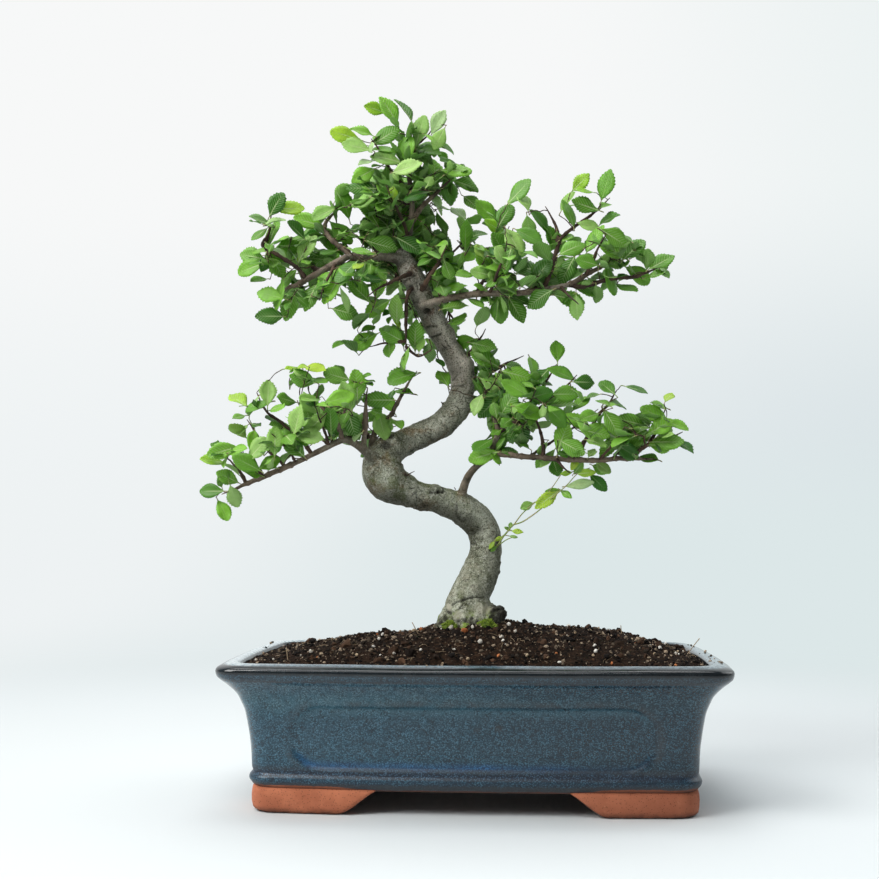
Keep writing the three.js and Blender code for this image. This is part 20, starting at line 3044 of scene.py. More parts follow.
        (15, 32.2, 371.6, 14.1, 33.6, 373.1, -0.43, 0.7, 0.57, 0.88, 0.19, 0.43, 18.4, 9.4, 0, 0),
        (13.7, 7.1, 340.2, 12, 8, 340.5, -0.88, 0.48, -0.04, 0.12, 0.3, 0.95, 18.2, 8.8, 0, 0),
        (-10, 14.8, 372.9, -9.3, 12.9, 373, 0.34, -0.93, -0.12, -0.24, -0.21, 0.95, 14.3, 7.1, 0, 0),
        (24.1, 20, 365.9, 24.8, 21.6, 365.3, 0.39, 0.78, -0.5, -0.42, 0.63, 0.65, 17.8, 10.1, 0, 0),
        (16.1, 8.6, 352.5, 14.5, 7.5, 352.5, -0.79, -0.58, -0.19, -0.32, 0.13, 0.94, 18.1, 10.5, 0, 0),
        (23.3, 31.7, 353.5, 23, 33.6, 354.2, -0.15, 0.97, 0.19, 0.26, -0.15, 0.96, 15.7, 8.3, 3, 0),
        (15.5, 23.9, 354.8, 15.4, 25.9, 355.4, -0.01, 1, 0.08, -0.13, -0.08, 0.99, 13.5, 7.3, 0, 0),
        (16.3, -7.4, 350.5, 16.4, -5.4, 351.1, 0.06, 1, 0.06, -0.08, -0.06, 1, 17.5, 9.9, 3, 0),
        (-8.2, 35.4, 366.9, -7.5, 37.3, 367.3, 0.31, 0.95, -0.01, 0.26, -0.07, 0.96, 16.4, 8.3, 0, 0),
        (20.7, 10.6, 375.2, 19.6, 11.3, 374, -0.54, 0.37, -0.76, -0.4, 0.68, 0.62, 13.5, 7.5, 0, 0),
        (-9.5, 23.4, 353.3, -9.5, 21.9, 352.3, 0, -0.72, -0.69, 1, 0.01, -0.01, 14.9, 7.7, 0, 0),
        (-1.3, 19.9, 362.5, -2.1, 18.1, 362.6, -0.43, -0.89, -0.14, 0.28, -0.28, 0.92, 16.2, 8.8, 0, 0),
        (17.1, 6.9, 350.1, 17.2, 7.2, 348.6, 0.11, 0.21, -0.97, 0.33, -0.93, -0.16, 8, 4.9, 0, 2),
        (21, -5.6, 357.1, 20.7, -3.9, 357.3, -0.12, 0.99, 0.12, -0.33, -0.15, 0.93, 12.7, 6.7, 0, 2),
        (15.3, -7.6, 349.5, 16.1, -6.4, 349.8, 0.51, 0.84, 0.19, 0.47, -0.46, 0.75, 8.9, 4.7, 0, 2),
        (19, -7.9, 352.7, 19, -8, 354.6, 0, -0.06, 1, -0.85, -0.53, -0.03, 7.1, 4.3, 0, 2),
        (-8.3, 1.1, 366.3, -8.2, 2.5, 366.7, 0.04, 0.96, 0.28, -0.43, -0.23, 0.87, 10.9, 6, 0, 2),
        (13, -10.7, 357.7, 14, -12.2, 358.9, 0.46, -0.71, 0.53, -0.5, 0.29, 0.82, 8.7, 4.2, 0, 2),
        (20.3, 19.9, 364.2, 20.2, 18.2, 363.9, -0.07, -0.98, -0.17, -0.65, -0.08, 0.75, 12.8, 7.7, 0, 2),
        (18.9, 10.7, 369.5, 18, 11.6, 369.8, -0.71, 0.67, 0.23, -0.52, -0.71, 0.48, 10.5, 5.8, 0, 2),
        (19.3, 27.8, 353.8, 18.8, 29.5, 354.1, -0.3, 0.93, 0.19, 0.14, -0.16, 0.98, 9.1, 5.1, 0, 2),
        (15.4, 23.9, 354.9, 13.8, 24.8, 354.4, -0.84, 0.48, -0.26, -0.34, -0.09, 0.93, 8.3, 4.8, 0, 2),
        (-10.9, 13.6, 357.9, -9.2, 12.8, 358.8, 0.81, -0.41, 0.42, -0.11, 0.61, 0.79, 9.2, 5, 0, 2),
        (8.8, 9.3, 340.9, 7.3, 9.5, 341.2, -0.98, 0.13, 0.18, 0.17, -0.07, 0.98, 6.7, 3.9, 0, 2),
        (19.8, 10.5, 376.1, 18.7, 11.4, 376.1, -0.8, 0.6, -0.04, 0.04, 0.12, 0.99, 6.6, 3.3, 0, 2),
        (19.5, 10.8, 369.9, 19.4, 12, 370.6, -0.08, 0.87, 0.48, -0.32, -0.48, 0.82, 10.5, 5.1, 0, 2),
        (22.8, 31.2, 353.5, 24, 30.6, 354.3, 0.77, -0.39, 0.5, -0.6, -0.18, 0.78, 6.7, 3.6, 3, 2),
        (19.7, 20.4, 363.5, 21.1, 21.6, 364.2, 0.74, 0.59, 0.33, -0.05, -0.44, 0.9, 10.7, 6, 0, 2),
        (18.7, 8.4, 353.6, 19.6, 8, 352.9, 0.73, -0.33, -0.6, 0.66, 0.11, 0.74, 7.8, 4.8, 0, 2),
        (13.1, 13.1, 349.7, 12.6, 11.4, 349.1, -0.27, -0.91, -0.31, 0.22, -0.37, 0.9, 8.1, 4.9, 0, 2),
        (15, 10.1, 351.5, 16.3, 10.5, 352.4, 0.8, 0.24, 0.55, -0.43, -0.42, 0.8, 10.8, 5.8, 0, 2),
        (15.9, -11.9, 366, 15.2, -13, 366.8, -0.46, -0.74, 0.49, 0.79, -0.1, 0.6, 11.6, 7.1, 0, 2),
        (22.3, 8.7, 355.1, 23.1, 10.1, 355.1, 0.52, 0.85, 0, -0.7, 0.43, 0.57, 9.4, 5.3, 3, 2),
        (14.9, -7.9, 350, 15.6, -7.5, 351, 0.53, 0.27, 0.8, -0.09, -0.93, 0.37, 7.2, 3.6, 0, 2),
        (-11.7, 17.9, 361.8, -10.7, 19.4, 362.6, 0.49, 0.78, 0.38, -0.02, -0.43, 0.9, 11.2, 6.2, 0, 2),
        (-5.2, 19.3, 365.8, -3.6, 18.2, 366, 0.84, -0.54, 0.08, -0.29, -0.32, 0.9, 7.9, 4.5, 0, 2),
        (17.4, 6.2, 349.2, 16.5, 5.2, 349.1, -0.69, -0.72, -0.09, 0.35, -0.44, 0.83, 9.4, 4.8, 0, 2),
        (13.9, 10, 381.3, 12.6, 11.1, 382.2, -0.71, 0.55, 0.44, -0.02, -0.63, 0.77, 6.7, 3.4, 0, 2),
        (-5.3, 21.2, 375.3, -4.8, 22.6, 376.2, 0.29, 0.81, 0.5, -0.51, -0.32, 0.8, 8.2, 4.9, 0, 2),
        (-6.5, 26.2, 368.2, -5.3, 27.5, 367.5, 0.63, 0.69, -0.37, 0.59, -0.1, 0.8, 7.7, 4.3, 3, 2),
        (18.9, 10.7, 369.5, 19.1, 10.4, 370.9, 0.14, -0.23, 0.96, 0.51, 0.85, 0.13, 11.5, 5.9, 3, 2),
    ]),
    ("shoot_right_upper_2", [
        (82.5, -7.8, 379.4, 83, -8.3, 381.6, 0.27, -0.26, 0.93, -0.42, -0.9, -0.13, 22, 12.1, 0, 1),
        (20.7, -12.7, 377.8, 22.1, -13.1, 379.6, 0.71, -0.21, 0.67, -0.43, -0.88, 0.18, 22, 12.7, 0, 1),
        (83.8, -14.7, 371.9, 81.9, -15.2, 372.8, -0.93, -0.28, 0.24, 0.32, -0.93, 0.16, 21.8, 11.2, 0, 1),
        (62.6, -8.6, 386.3, 64, -9, 388.1, 0.71, -0.21, 0.67, -0.17, -0.98, -0.12, 16.4, 9.7, 1, 1),
        (49.5, -10.2, 356, 48.6, -10.8, 358, -0.47, -0.3, 0.83, 0.75, -0.64, 0.2, 21.9, 12.7, 0, 1),
        (65, -15, 360.1, 64.5, -14.8, 362.4, -0.26, 0.1, 0.96, 0.72, -0.65, 0.26, 21.9, 12.6, 0, 1),
        (80.1, -2.1, 365.2, 81.6, -3.2, 366.4, 0.75, -0.55, 0.36, -0.65, -0.56, 0.51, 16.7, 9.6, 0, 1),
        (64.7, -9.1, 367.1, 66.4, -9.9, 367, 0.87, -0.41, -0.27, -0.19, -0.78, 0.59, 15.7, 8.3, 0, 1),
        (53, -6.6, 347.1, 52.5, -7.2, 349.3, -0.24, -0.29, 0.93, 0.53, -0.84, -0.13, 16.4, 9, 0, 1),
        (35.8, -18.7, 369.9, 35.3, -18.1, 372.2, -0.26, 0.27, 0.93, 0.42, -0.83, 0.36, 17.1, 9, 0, 1),
        (33.8, -24, 370.3, 34.1, -22.7, 369.2, 0.17, 0.64, -0.75, 0.36, 0.67, 0.66, 16.5, 9.7, 0, 1),
        (80.5, -9.7, 385.9, 79, -11, 386.2, -0.74, -0.67, -0.05, 0.32, -0.42, 0.85, 17.4, 8.7, 1, 1),
        (80.4, -12.3, 374.5, 81.6, -10.9, 375.7, 0.58, 0.7, 0.42, 0.09, -0.57, 0.82, 13.6, 7.1, 0, 1),
        (55.5, -3.6, 373.5, 56.5, -4.2, 375.5, 0.5, -0.29, 0.81, -0.78, -0.55, 0.28, 16.7, 9.8, 0, 1),
        (56.2, -16.1, 351.2, 57.2, -14.8, 352.7, 0.47, 0.68, 0.57, -0.06, -0.62, 0.79, 13.5, 7.8, 0, 1),
        (65, 8.4, 347.9, 63.7, 7, 347.8, -0.65, -0.72, -0.24, 0.14, -0.43, 0.89, 11, 6.3, 0, 1),
        (55.2, -18.6, 352.9, 54.1, -17.2, 352.4, -0.56, 0.69, -0.45, -0.12, 0.48, 0.87, 10.8, 5.1, 0, 1),
        (44.1, 20, 335.9, 45.7, 21.1, 336.3, 0.83, 0.55, 0.04, -0.23, 0.27, 0.93, 14.8, 8.3, 0, 0),
        (49.6, 1.9, 350.7, 49.7, 3.8, 350.4, 0.06, 0.94, -0.33, 0.01, 0.33, 0.94, 17.7, 10.2, 0, 0),
        (40.2, 14, 343.5, 40.6, 15.9, 343.9, 0.23, 0.97, -0.02, 0.36, -0.07, 0.93, 17.3, 9.7, 0, 0),
        (57.1, 4, 347, 57.8, 5.8, 346.6, 0.35, 0.86, -0.37, 0.18, 0.32, 0.93, 13.4, 7.4, 0, 0),
        (77.8, -2.3, 378.8, 76.7, -4, 379.3, -0.55, -0.84, 0.07, 0.02, 0.06, 1, 12.5, 6.8, 0, 0),
        (54.5, -2.6, 344.2, 54.2, -0.7, 344.1, -0.18, 0.95, -0.27, 0.2, 0.3, 0.93, 17.1, 9.8, 0, 0),
        (60, 4.1, 344.6, 60.3, 6.1, 345.2, 0.14, 0.99, 0.09, 0.03, -0.09, 1, 16.9, 8.6, 0, 0),
        (43.1, 13.2, 336, 43.1, 15.1, 337.1, 0.03, 0.95, 0.32, 0.02, -0.32, 0.95, 19.1, 9.4, 3, 0),
        (64.4, -17.9, 342.3, 63.5, -16.4, 343.6, -0.45, 0.77, 0.45, -0.12, -0.55, 0.83, 13.1, 7.5, 0, 0),
        (49.9, 12.8, 355, 51.6, 11.8, 355.6, 0.85, -0.52, 0.09, 0.25, 0.54, 0.8, 13.1, 7.2, 0, 0),
        (56.2, 9.5, 345.8, 56.5, 11.2, 345.2, 0.15, 0.85, -0.5, 0.36, 0.42, 0.83, 15.5, 8.5, 0, 0),
        (53.5, -15.9, 361.2, 53.6, -14.5, 360.1, 0.07, 0.69, -0.72, -0.18, 0.72, 0.68, 15, 8.4, 0, 0),
        (80.3, -3.4, 361.2, 79.4, -2.1, 360.4, -0.42, 0.66, -0.62, 0.02, 0.69, 0.73, 13.5, 7.2, 0, 0),
        (75.5, -9.8, 377.9, 73.9, -8.6, 378.8, -0.79, 0.58, 0.22, -0.07, -0.45, 0.89, 17.3, 8.8, 3, 0),
        (54.4, -1.3, 345, 53.7, 0.6, 345.7, -0.35, 0.93, 0.12, 0.52, 0.09, 0.85, 14.4, 7, 0, 0),
        (62.1, 4.6, 361, 62.7, 6.5, 361.5, 0.32, 0.95, 0.03, 0.07, -0.05, 1, 16.9, 9.8, 0, 0),
        (20.6, -12.7, 377.6, 21.6, -11.9, 378.7, 0.61, 0.46, 0.65, -0.15, -0.73, 0.66, 9.3, 4.7, 3, 2),
        (50.5, -10.6, 355.7, 49.9, -11.1, 357, -0.42, -0.34, 0.84, 0.89, 0.04, 0.46, 9.5, 5.3, 0, 2),
        (85, -3.3, 385.3, 85, -4.1, 386.9, -0.02, -0.48, 0.88, -0.98, -0.14, -0.1, 7.9, 4.3, 0, 2),
        (61.4, -1.4, 361.7, 62.1, -0.4, 360.9, 0.52, 0.68, -0.52, -0.12, 0.66, 0.74, 10.6, 5.1, 0, 2),
        (59.1, -1.9, 334.6, 59.8, -2.4, 335.8, 0.44, -0.37, 0.82, 0.47, 0.87, 0.14, 10.3, 5.8, 0, 2),
        (40.8, 13.8, 340.7, 39.8, 14.2, 341.4, -0.78, 0.28, 0.55, 0.3, -0.61, 0.74, 10.8, 6.1, 0, 2),
        (42.9, 15.6, 336, 41.9, 15.9, 336.8, -0.76, 0.2, 0.62, 0.46, -0.5, 0.73, 8.9, 5.3, 0, 2),
        (49.5, 2.8, 351.2, 49.4, 3.9, 350.1, -0.05, 0.67, -0.74, -0.63, 0.56, 0.54, 7.9, 4.8, 0, 2),
        (76.5, -10.3, 377.3, 76.2, -9.1, 377.7, -0.2, 0.9, 0.38, 0.15, -0.36, 0.92, 12.3, 7.1, 0, 2),
        (53.4, 2.6, 336.2, 55, 3.9, 336.6, 0.74, 0.65, 0.19, -0.11, -0.16, 0.98, 8.8, 5.5, 0, 2),
        (59, 13.6, 343.8, 60, 14.1, 344.3, 0.79, 0.42, 0.45, -0.33, -0.33, 0.88, 7.6, 4.2, 0, 2),
        (80.2, -2.6, 363.8, 80.5, -1.4, 362.9, 0.21, 0.77, -0.6, 0.56, 0.4, 0.72, 6.7, 3.6, 0, 2),
        (68.1, 14.4, 339.4, 69.5, 13.7, 339.9, 0.86, -0.41, 0.31, -0.4, -0.15, 0.91, 8.2, 4.3, 0, 2),
        (63.5, -7.5, 365, 63.1, -8.7, 366.5, -0.2, -0.63, 0.75, -0.46, -0.62, -0.64, 7.3, 3.5, 0, 2),
        (41, 13.8, 340.1, 41.7, 14.7, 340.9, 0.53, 0.61, 0.6, -0.48, -0.36, 0.8, 9, 4.6, 0, 2),
        (64.3, 14.1, 341.5, 66, 13.7, 342.5, 0.85, -0.16, 0.51, -0.53, -0.18, 0.83, 11.8, 5.7, 0, 2),
    ]),
    ("shoot_right_upper_3", [
        (93.8, -23.5, 336.4, 95.2, -23.2, 338.2, 0.68, 0.18, 0.71, -0.08, -0.94, 0.32, 21.6, 11.4, 0, 1),
        (95.1, -15.3, 336.8, 96.8, -14.7, 336.2, 0.83, 0.29, -0.47, 0.33, -0.94, -0.01, 21.8, 10.9, 0, 1),
        (76.3, -21.6, 338.3, 78.2, -21.1, 338.8, 0.97, 0.26, 0.02, 0.23, -0.88, 0.41, 21.7, 12.1, 0, 1),
        (78.5, -35.1, 356.2, 80.2, -34.6, 355.7, 0.83, 0.29, -0.47, 0.35, -0.94, 0.03, 21.3, 10.8, 0, 1),
        (71.4, -16.9, 342.7, 72.4, -17.4, 344.8, 0.51, -0.23, 0.83, -0.66, -0.73, 0.19, 21.7, 12.5, 0, 1),
        (109.7, -22.3, 330.6, 111.3, -21.9, 332.1, 0.84, 0.21, 0.5, -0.11, -0.84, 0.53, 21.6, 10.6, 0, 1),
        (88.6, -15.6, 325.5, 90.1, -16.5, 325, 0.75, -0.48, -0.46, 0.06, -0.64, 0.77, 18.9, 11.2, 0, 1),
        (84.4, -18.5, 337.5, 85, -18.7, 335.9, 0.26, -0.1, -0.96, 0.68, -0.69, 0.26, 21.6, 11.7, 0, 1),
        (110.7, -13.6, 331.1, 110.8, -15.1, 332.9, 0.05, -0.75, 0.66, 0.34, 0.64, 0.69, 18.5, 8.7, 0, 1),
        (99.5, -20.6, 338.3, 97.9, -21.2, 339.6, -0.83, -0.29, 0.47, 0.44, -0.86, 0.25, 21.5, 12, 0, 1),
        (108.3, -12.5, 328.2, 110, -13.4, 328.9, 0.87, -0.45, 0.18, -0.46, -0.64, 0.62, 15.5, 8.5, 0, 1),
        (92.2, -16.8, 324.7, 93.1, -15.4, 326.2, 0.47, 0.68, 0.57, 0.11, -0.68, 0.72, 13.4, 6.8, 0, 1),
        (118.9, -17.4, 333.2, 120, -15.9, 333, 0.58, 0.76, -0.3, -0.11, 0.44, 0.89, 10.7, 5.4, 0, 1),
        (102.5, -22.7, 348.7, 101.4, -21.5, 350.2, -0.55, 0.61, 0.57, 0.39, -0.42, 0.82, 10.7, 6.1, 0, 1),
        (83.7, -16.5, 359.2, 85.3, -17.8, 359.5, 0.77, -0.64, -0.06, -0.34, -0.48, 0.81, 10.6, 5.8, 0, 1),
        (89.6, -20.8, 327.5, 88.5, -19.4, 327, -0.56, 0.69, -0.45, -0.23, 0.39, 0.89, 10.7, 5.8, 0, 1),
        (103.4, -22.1, 344.6, 104.3, -20.6, 344.1, 0.46, 0.76, -0.45, 0.33, 0.32, 0.89, 10.7, 6, 0, 1),
        (101.2, -12.2, 341.5, 100.2, -13.6, 340.8, -0.47, -0.68, -0.57, -0.29, -0.49, 0.82, 10.7, 5.6, 0, 1),
        (91.7, -21.5, 342.3, 92.8, -22.9, 343.6, 0.56, -0.69, 0.45, -0.28, 0.35, 0.89, 10.5, 5, 0, 1),
        (115.6, -12.6, 332.8, 116.7, -11.1, 333.9, 0.59, 0.74, 0.32, -0.79, 0.61, 0.04, 13.6, 6.7, 0, 0),
        (88.1, -18.8, 328.1, 87.7, -20.7, 328, -0.18, -0.95, -0.26, 0.05, -0.28, 0.96, 17.1, 9.1, 3, 0),
        (119.2, -6.1, 334.8, 119.4, -8, 334.7, 0.1, -0.96, -0.27, 0.15, -0.26, 0.95, 12.5, 6.6, 0, 0),
        (94.8, -7.6, 343, 95.2, -5.8, 344.1, 0.2, 0.91, 0.37, -0.57, -0.2, 0.8, 18.9, 10.5, 0, 0),
        (87.6, -22.1, 339, 88, -20.2, 339.5, 0.16, 0.98, 0.07, -0.31, -0.02, 0.95, 17.5, 10.1, 0, 0),
        (82.3, 15.4, 331.4, 83.3, 16.1, 333.4, 0.53, 0.35, 0.77, -0.82, 0.44, 0.36, 15.8, 8.5, 0, 0),
        (72.3, -36.7, 347.6, 73.9, -35.7, 347.6, 0.83, 0.51, -0.21, 0.42, -0.33, 0.85, 19.1, 11.2, 0, 0),
        (98.6, -19.2, 345.1, 98.6, -17.2, 345.6, -0.02, 1, 0.01, -0.26, -0.02, 0.96, 16.4, 9.6, 0, 0),
        (85.6, -25.7, 344.2, 84.6, -24.9, 346.1, -0.5, 0.41, 0.76, 0.28, -0.75, 0.6, 14.8, 8.5, 0, 0),
        (84.1, -17.1, 338.6, 84.6, -18.8, 338.1, 0.24, -0.86, -0.44, 0.79, -0.09, 0.6, 14.7, 8.1, 0, 0),
        (84.4, -14.1, 335.7, 85, -16, 336.1, 0.3, -0.95, 0.02, -0.35, -0.09, 0.93, 12.8, 7, 0, 0),
        (96.2, -13.5, 340.2, 95.5, -15, 341.8, -0.35, -0.73, 0.58, -0.39, 0.68, 0.62, 17.8, 9.4, 0, 0),
        (115.5, -12.5, 333.7, 116.5, -13.3, 333.1, 0.74, -0.52, -0.43, -0.02, -0.65, 0.76, 8.3, 4.2, 0, 2),
        (89.4, -20, 327.3, 91, -20.8, 327.5, 0.89, -0.44, 0.13, -0.4, -0.59, 0.7, 7.8, 4.1, 0, 2),
        (99, -13.3, 342.5, 100.2, -12.9, 343.9, 0.63, 0.23, 0.74, -0.62, 0.73, 0.3, 8.2, 4.2, 0, 2),
        (84.2, -18.5, 336.7, 85.4, -19.7, 337.7, 0.6, -0.62, 0.51, 0.13, 0.7, 0.7, 11, 6.2, 0, 2),
        (98.2, -16.7, 344.2, 100.1, -17.3, 343.6, 0.92, -0.28, -0.26, 0.2, -0.24, 0.95, 12.7, 7.6, 0, 2),
        (95.1, -9.9, 342.6, 95, -8.6, 344, -0.02, 0.65, 0.76, -0.04, -0.76, 0.65, 12.1, 6.4, 0, 2),
        (81.8, -8.7, 359.4, 81.3, -9.8, 358.4, -0.32, -0.7, -0.64, -0.39, -0.52, 0.76, 11.6, 7.1, 0, 2),
        (89.5, -22.8, 338.6, 90.5, -22, 340.2, 0.51, 0.39, 0.77, -0.49, -0.6, 0.63, 10.9, 5.3, 0, 2),
        (95.7, -14.4, 341.8, 95.4, -15.7, 340, -0.12, -0.56, -0.82, -0.11, -0.81, 0.57, 7.8, 4.5, 0, 2),
        (103, -21.9, 344.7, 102.9, -23.7, 345.2, -0.04, -0.96, 0.27, -0.08, 0.27, 0.96, 8.9, 5, 0, 2),
        (90.3, -18.4, 340.2, 92, -18.8, 340.5, 0.96, -0.23, 0.16, -0.17, -0.02, 0.98, 8.5, 4.8, 0, 2),
        (74.5, 14.6, 335.8, 75.7, 16.3, 335.5, 0.55, 0.82, -0.15, -0.31, 0.36, 0.88, 8.4, 5, 0, 2),
        (95.3, -12.3, 342.3, 94.5, -12.2, 343.2, -0.67, 0.11, 0.73, 0.57, -0.56, 0.6, 11.1, 6, 0, 2),
        (95.6, -14.8, 342.1, 96.1, -15.4, 343.1, 0.36, -0.49, 0.79, -0.89, 0.07, 0.45, 7, 3.7, 0, 2),
        (91.6, -23.4, 337.9, 92.3, -23.9, 338.9, 0.51, -0.4, 0.77, -0.48, 0.61, 0.63, 8.2, 4.3, 0, 2),
        (88.1, -18.8, 328.1, 87.9, -16.9, 327.8, -0.14, 0.98, -0.16, -0.62, 0.04, 0.78, 8.5, 4.8, 0, 2),
        (83.3, -15, 359.2, 85.1, -14.8, 359, 0.99, 0.1, -0.14, 0.17, -0.41, 0.9, 8.1, 3.9, 3, 2),
        (103.7, -18.7, 330.2, 102.7, -20.4, 331, -0.51, -0.78, 0.36, -0.86, 0.44, -0.26, 8.4, 4.3, 0, 2),
        (84.4, -18.2, 337.7, 85.6, -17.2, 339, 0.6, 0.51, 0.61, -0.3, -0.56, 0.77, 10.2, 5, 0, 2),
        (101.1, -12.2, 341.5, 102.8, -13, 342.2, 0.85, -0.39, 0.35, -0.3, 0.17, 0.94, 6.8, 3.3, 0, 2),
        (85.8, -25.5, 343.8, 85.8, -26.9, 344, 0, -0.99, 0.15, -0.41, 0.13, 0.9, 8.7, 4.7, 0, 2),
        (102.7, -22.6, 348, 101.1, -22.9, 348.7, -0.91, -0.17, 0.38, 0.32, 0.32, 0.89, 8.5, 4.2, 0, 2),
        (98.5, -18.2, 344.8, 99.7, -18.9, 345.2, 0.83, -0.47, 0.31, -0.34, 0.02, 0.94, 9, 4.4, 0, 2),
    ]),
    ("shoot_right_upper_4", [
        (20.5, -22.1, 317.5, 21.5, -22.3, 316.1, 0.5, -0.09, -0.86, 0.3, -0.91, 0.27, 21.6, 11.4, 0, 1),
        (25.1, -25.1, 359.6, 26.8, -25.3, 358.9, 0.86, -0.1, -0.5, 0.19, -0.85, 0.49, 21.6, 12.7, 0, 1),
        (22.8, -11.9, 339.4, 21.8, -12.5, 341.5, -0.47, -0.3, 0.83, 0.54, -0.84, 0, 21.9, 12.1, 0, 1),
        (9.2, -7.7, 330, 8.7, -8.3, 332.3, -0.24, -0.29, 0.93, 0.43, -0.89, -0.17, 22, 11.5, 0, 1),
        (46.4, -19, 331.5, 44.5, -18.8, 332.4, -0.96, 0.11, 0.27, 0.02, -0.9, 0.44, 21.8, 12.2, 0, 1),
        (6.5, -18.6, 323.1, 7.9, -18.3, 324.9, 0.68, 0.18, 0.71, -0.07, -0.95, 0.31, 21.8, 11.5, 0, 1),
        (19.6, -41.1, 356.9, 20.6, -41.3, 355.5, 0.5, -0.09, -0.86, 0.09, -0.98, 0.16, 21.1, 10.5, 3, 1),
        (7, -22, 317, 8.9, -22.3, 317.9, 0.96, -0.15, 0.24, -0.23, -0.91, 0.34, 21.6, 12, 0, 1),
        (36.5, -18.5, 321.3, 37.5, -19, 323.4, 0.51, -0.23, 0.83, -0.5, -0.86, 0.06, 21.6, 12.7, 0, 1),
        (50.3, -19.1, 336.9, 49.3, -20.5, 338.3, -0.5, -0.72, 0.49, -0.1, 0.61, 0.79, 20.4, 10.7, 0, 1),
        (49.1, -12.4, 323, 47.2, -12.2, 324, -0.96, 0.11, 0.27, 0.16, -0.57, 0.81, 21.9, 12.5, 0, 1),
        (13.1, -23.2, 340.2, 15, -22.7, 341.2, 0.93, 0.24, 0.27, 0.02, -0.78, 0.62, 21.7, 11.5, 0, 1),
        (18.2, -8.9, 335.6, 19.3, -10.1, 334.8, 0.55, -0.61, -0.57, 0.05, -0.66, 0.75, 13.5, 7.1, 0, 1),
        (20.6, -22.9, 318.4, 22.3, -22.3, 317.8, 0.83, 0.29, -0.47, 0.55, -0.59, 0.59, 18.7, 9.4, 0, 1),
        (27.3, -37.9, 340.9, 28.8, -39.1, 340.8, 0.77, -0.59, -0.25, -0.04, -0.43, 0.9, 15, 7.3, 0, 1),
        (33.4, -13.2, 322.3, 32.1, -12, 323.6, -0.67, 0.61, 0.42, 0.02, -0.54, 0.84, 13.6, 7.5, 0, 1),
        (34.5, -22.1, 328, 33.1, -20.9, 329.3, -0.67, 0.61, 0.42, 0.16, -0.43, 0.89, 10.7, 6.2, 0, 1),
        (-2.9, -17.5, 350, -1.4, -18.8, 349.9, 0.74, -0.62, -0.24, -0.12, -0.48, 0.87, 10.7, 5.7, 3, 1),
        (26.1, -16.6, 344.6, 25.7, -15.1, 343.8, -0.24, 0.73, -0.64, -0.75, 0.28, 0.6, 10.8, 6.1, 0, 1),
        (22.3, -39.5, 311, 23.2, -38.1, 312.6, 0.47, 0.68, 0.57, -0.33, -0.47, 0.82, 10.5, 5.9, 0, 1),
        (14.2, -21.7, 319.1, 15, -20, 320.1, 0.42, 0.85, 0.31, -0.86, 0.49, -0.18, 13.6, 6.7, 0, 0),
        (25.4, -19.1, 345.7, 25.4, -17.1, 345.9, -0.02, 1, -0.08, 0.25, 0.08, 0.96, 15.8, 8, 0, 0),
        (37, -18.6, 323.6, 36.5, -16.7, 323.7, -0.26, 0.95, -0.16, -0.25, 0.09, 0.96, 18.1, 8.7, 0, 0),
        (8.1, -22.7, 342.2, 9.6, -24, 342.2, 0.74, -0.63, -0.22, 0.07, -0.26, 0.96, 17.6, 10, 0, 0),
        (46.1, -20.3, 315.8, 44.6, -19.9, 317.5, -0.76, 0.18, 0.63, 0.63, 0.45, 0.63, 14.5, 8.1, 3, 0),
        (20.1, -46.3, 327.9, 19.4, -46.7, 330.2, -0.33, -0.24, 0.91, 0.51, -0.86, -0.04, 13.4, 7.3, 3, 0),
        (24.1, -22.8, 318.7, 25.2, -21.1, 319.4, 0.52, 0.84, 0.13, 0.18, -0.26, 0.95, 19.1, 9.4, 0, 0),
        (25.1, -45.3, 343.4, 24.4, -45.3, 341.9, -0.33, 0, -0.94, -0.47, -0.86, 0.17, 16.3, 8.9, 0, 0),
        (19.9, -8.1, 353.4, 19.2, -9.6, 352.7, -0.36, -0.75, -0.55, 0.03, -0.6, 0.8, 18.2, 10.2, 0, 0),
        (22.3, -45.1, 336, 22.4, -47, 335.9, 0.04, -0.96, -0.28, -0.15, -0.28, 0.95, 14, 8.3, 0, 0),
        (8.6, -7.7, 315.1, 10.3, -8.8, 315.5, 0.85, -0.52, -0.03, 0.31, 0.46, 0.83, 14.5, 8.1, 3, 0),
        (21.2, -5.9, 342.1, 22.6, -4.9, 343.5, 0.71, 0.5, 0.5, -0.41, -0.29, 0.87, 13.5, 7.9, 0, 0),
        (41.9, -23.2, 328.6, 42, -21.3, 328.5, 0.05, 0.96, -0.28, -0.05, 0.28, 0.96, 13.7, 7.8, 0, 0),
        (49.7, -22.9, 331.7, 48.1, -23.4, 330.9, -0.77, -0.27, -0.57, -0.6, 0.03, 0.8, 17.8, 10, 0, 0),
        (17.6, -25.1, 318.1, 18.2, -23.5, 317.6, 0.35, 0.84, -0.42, 0.25, 0.35, 0.9, 18.7, 10.9, 0, 0),
        (16.7, -18.9, 316.6, 17.5, -20.7, 316.7, 0.4, -0.9, -0.16, 0.12, -0.12, 0.99, 18.7, 9.7, 0, 0),
        (15.2, -7.7, 349.3, 14.5, -8.2, 347.9, -0.35, -0.25, -0.9, -0.93, -0.02, 0.36, 14.1, 7.5, 0, 0),
        (3.3, -20, 335.1, 4.4, -21.6, 334.9, 0.55, -0.79, -0.27, -0.06, -0.36, 0.93, 19.1, 11.1, 0, 0),
        (23.5, -14.5, 313.6, 22.7, -13.2, 315.3, -0.39, 0.63, 0.67, -0.39, -0.77, 0.5, 19.3, 10.2, 0, 0),
        (24.6, -19.1, 340.6, 23.2, -20.4, 341.6, -0.68, -0.68, 0.27, 0.65, -0.39, 0.65, 14.3, 7, 0, 0),
        (22.4, -34.2, 348.1, 23.3, -35.5, 347.3, 0.45, -0.66, -0.61, 0.51, -0.37, 0.78, 13.8, 7.8, 0, 0),
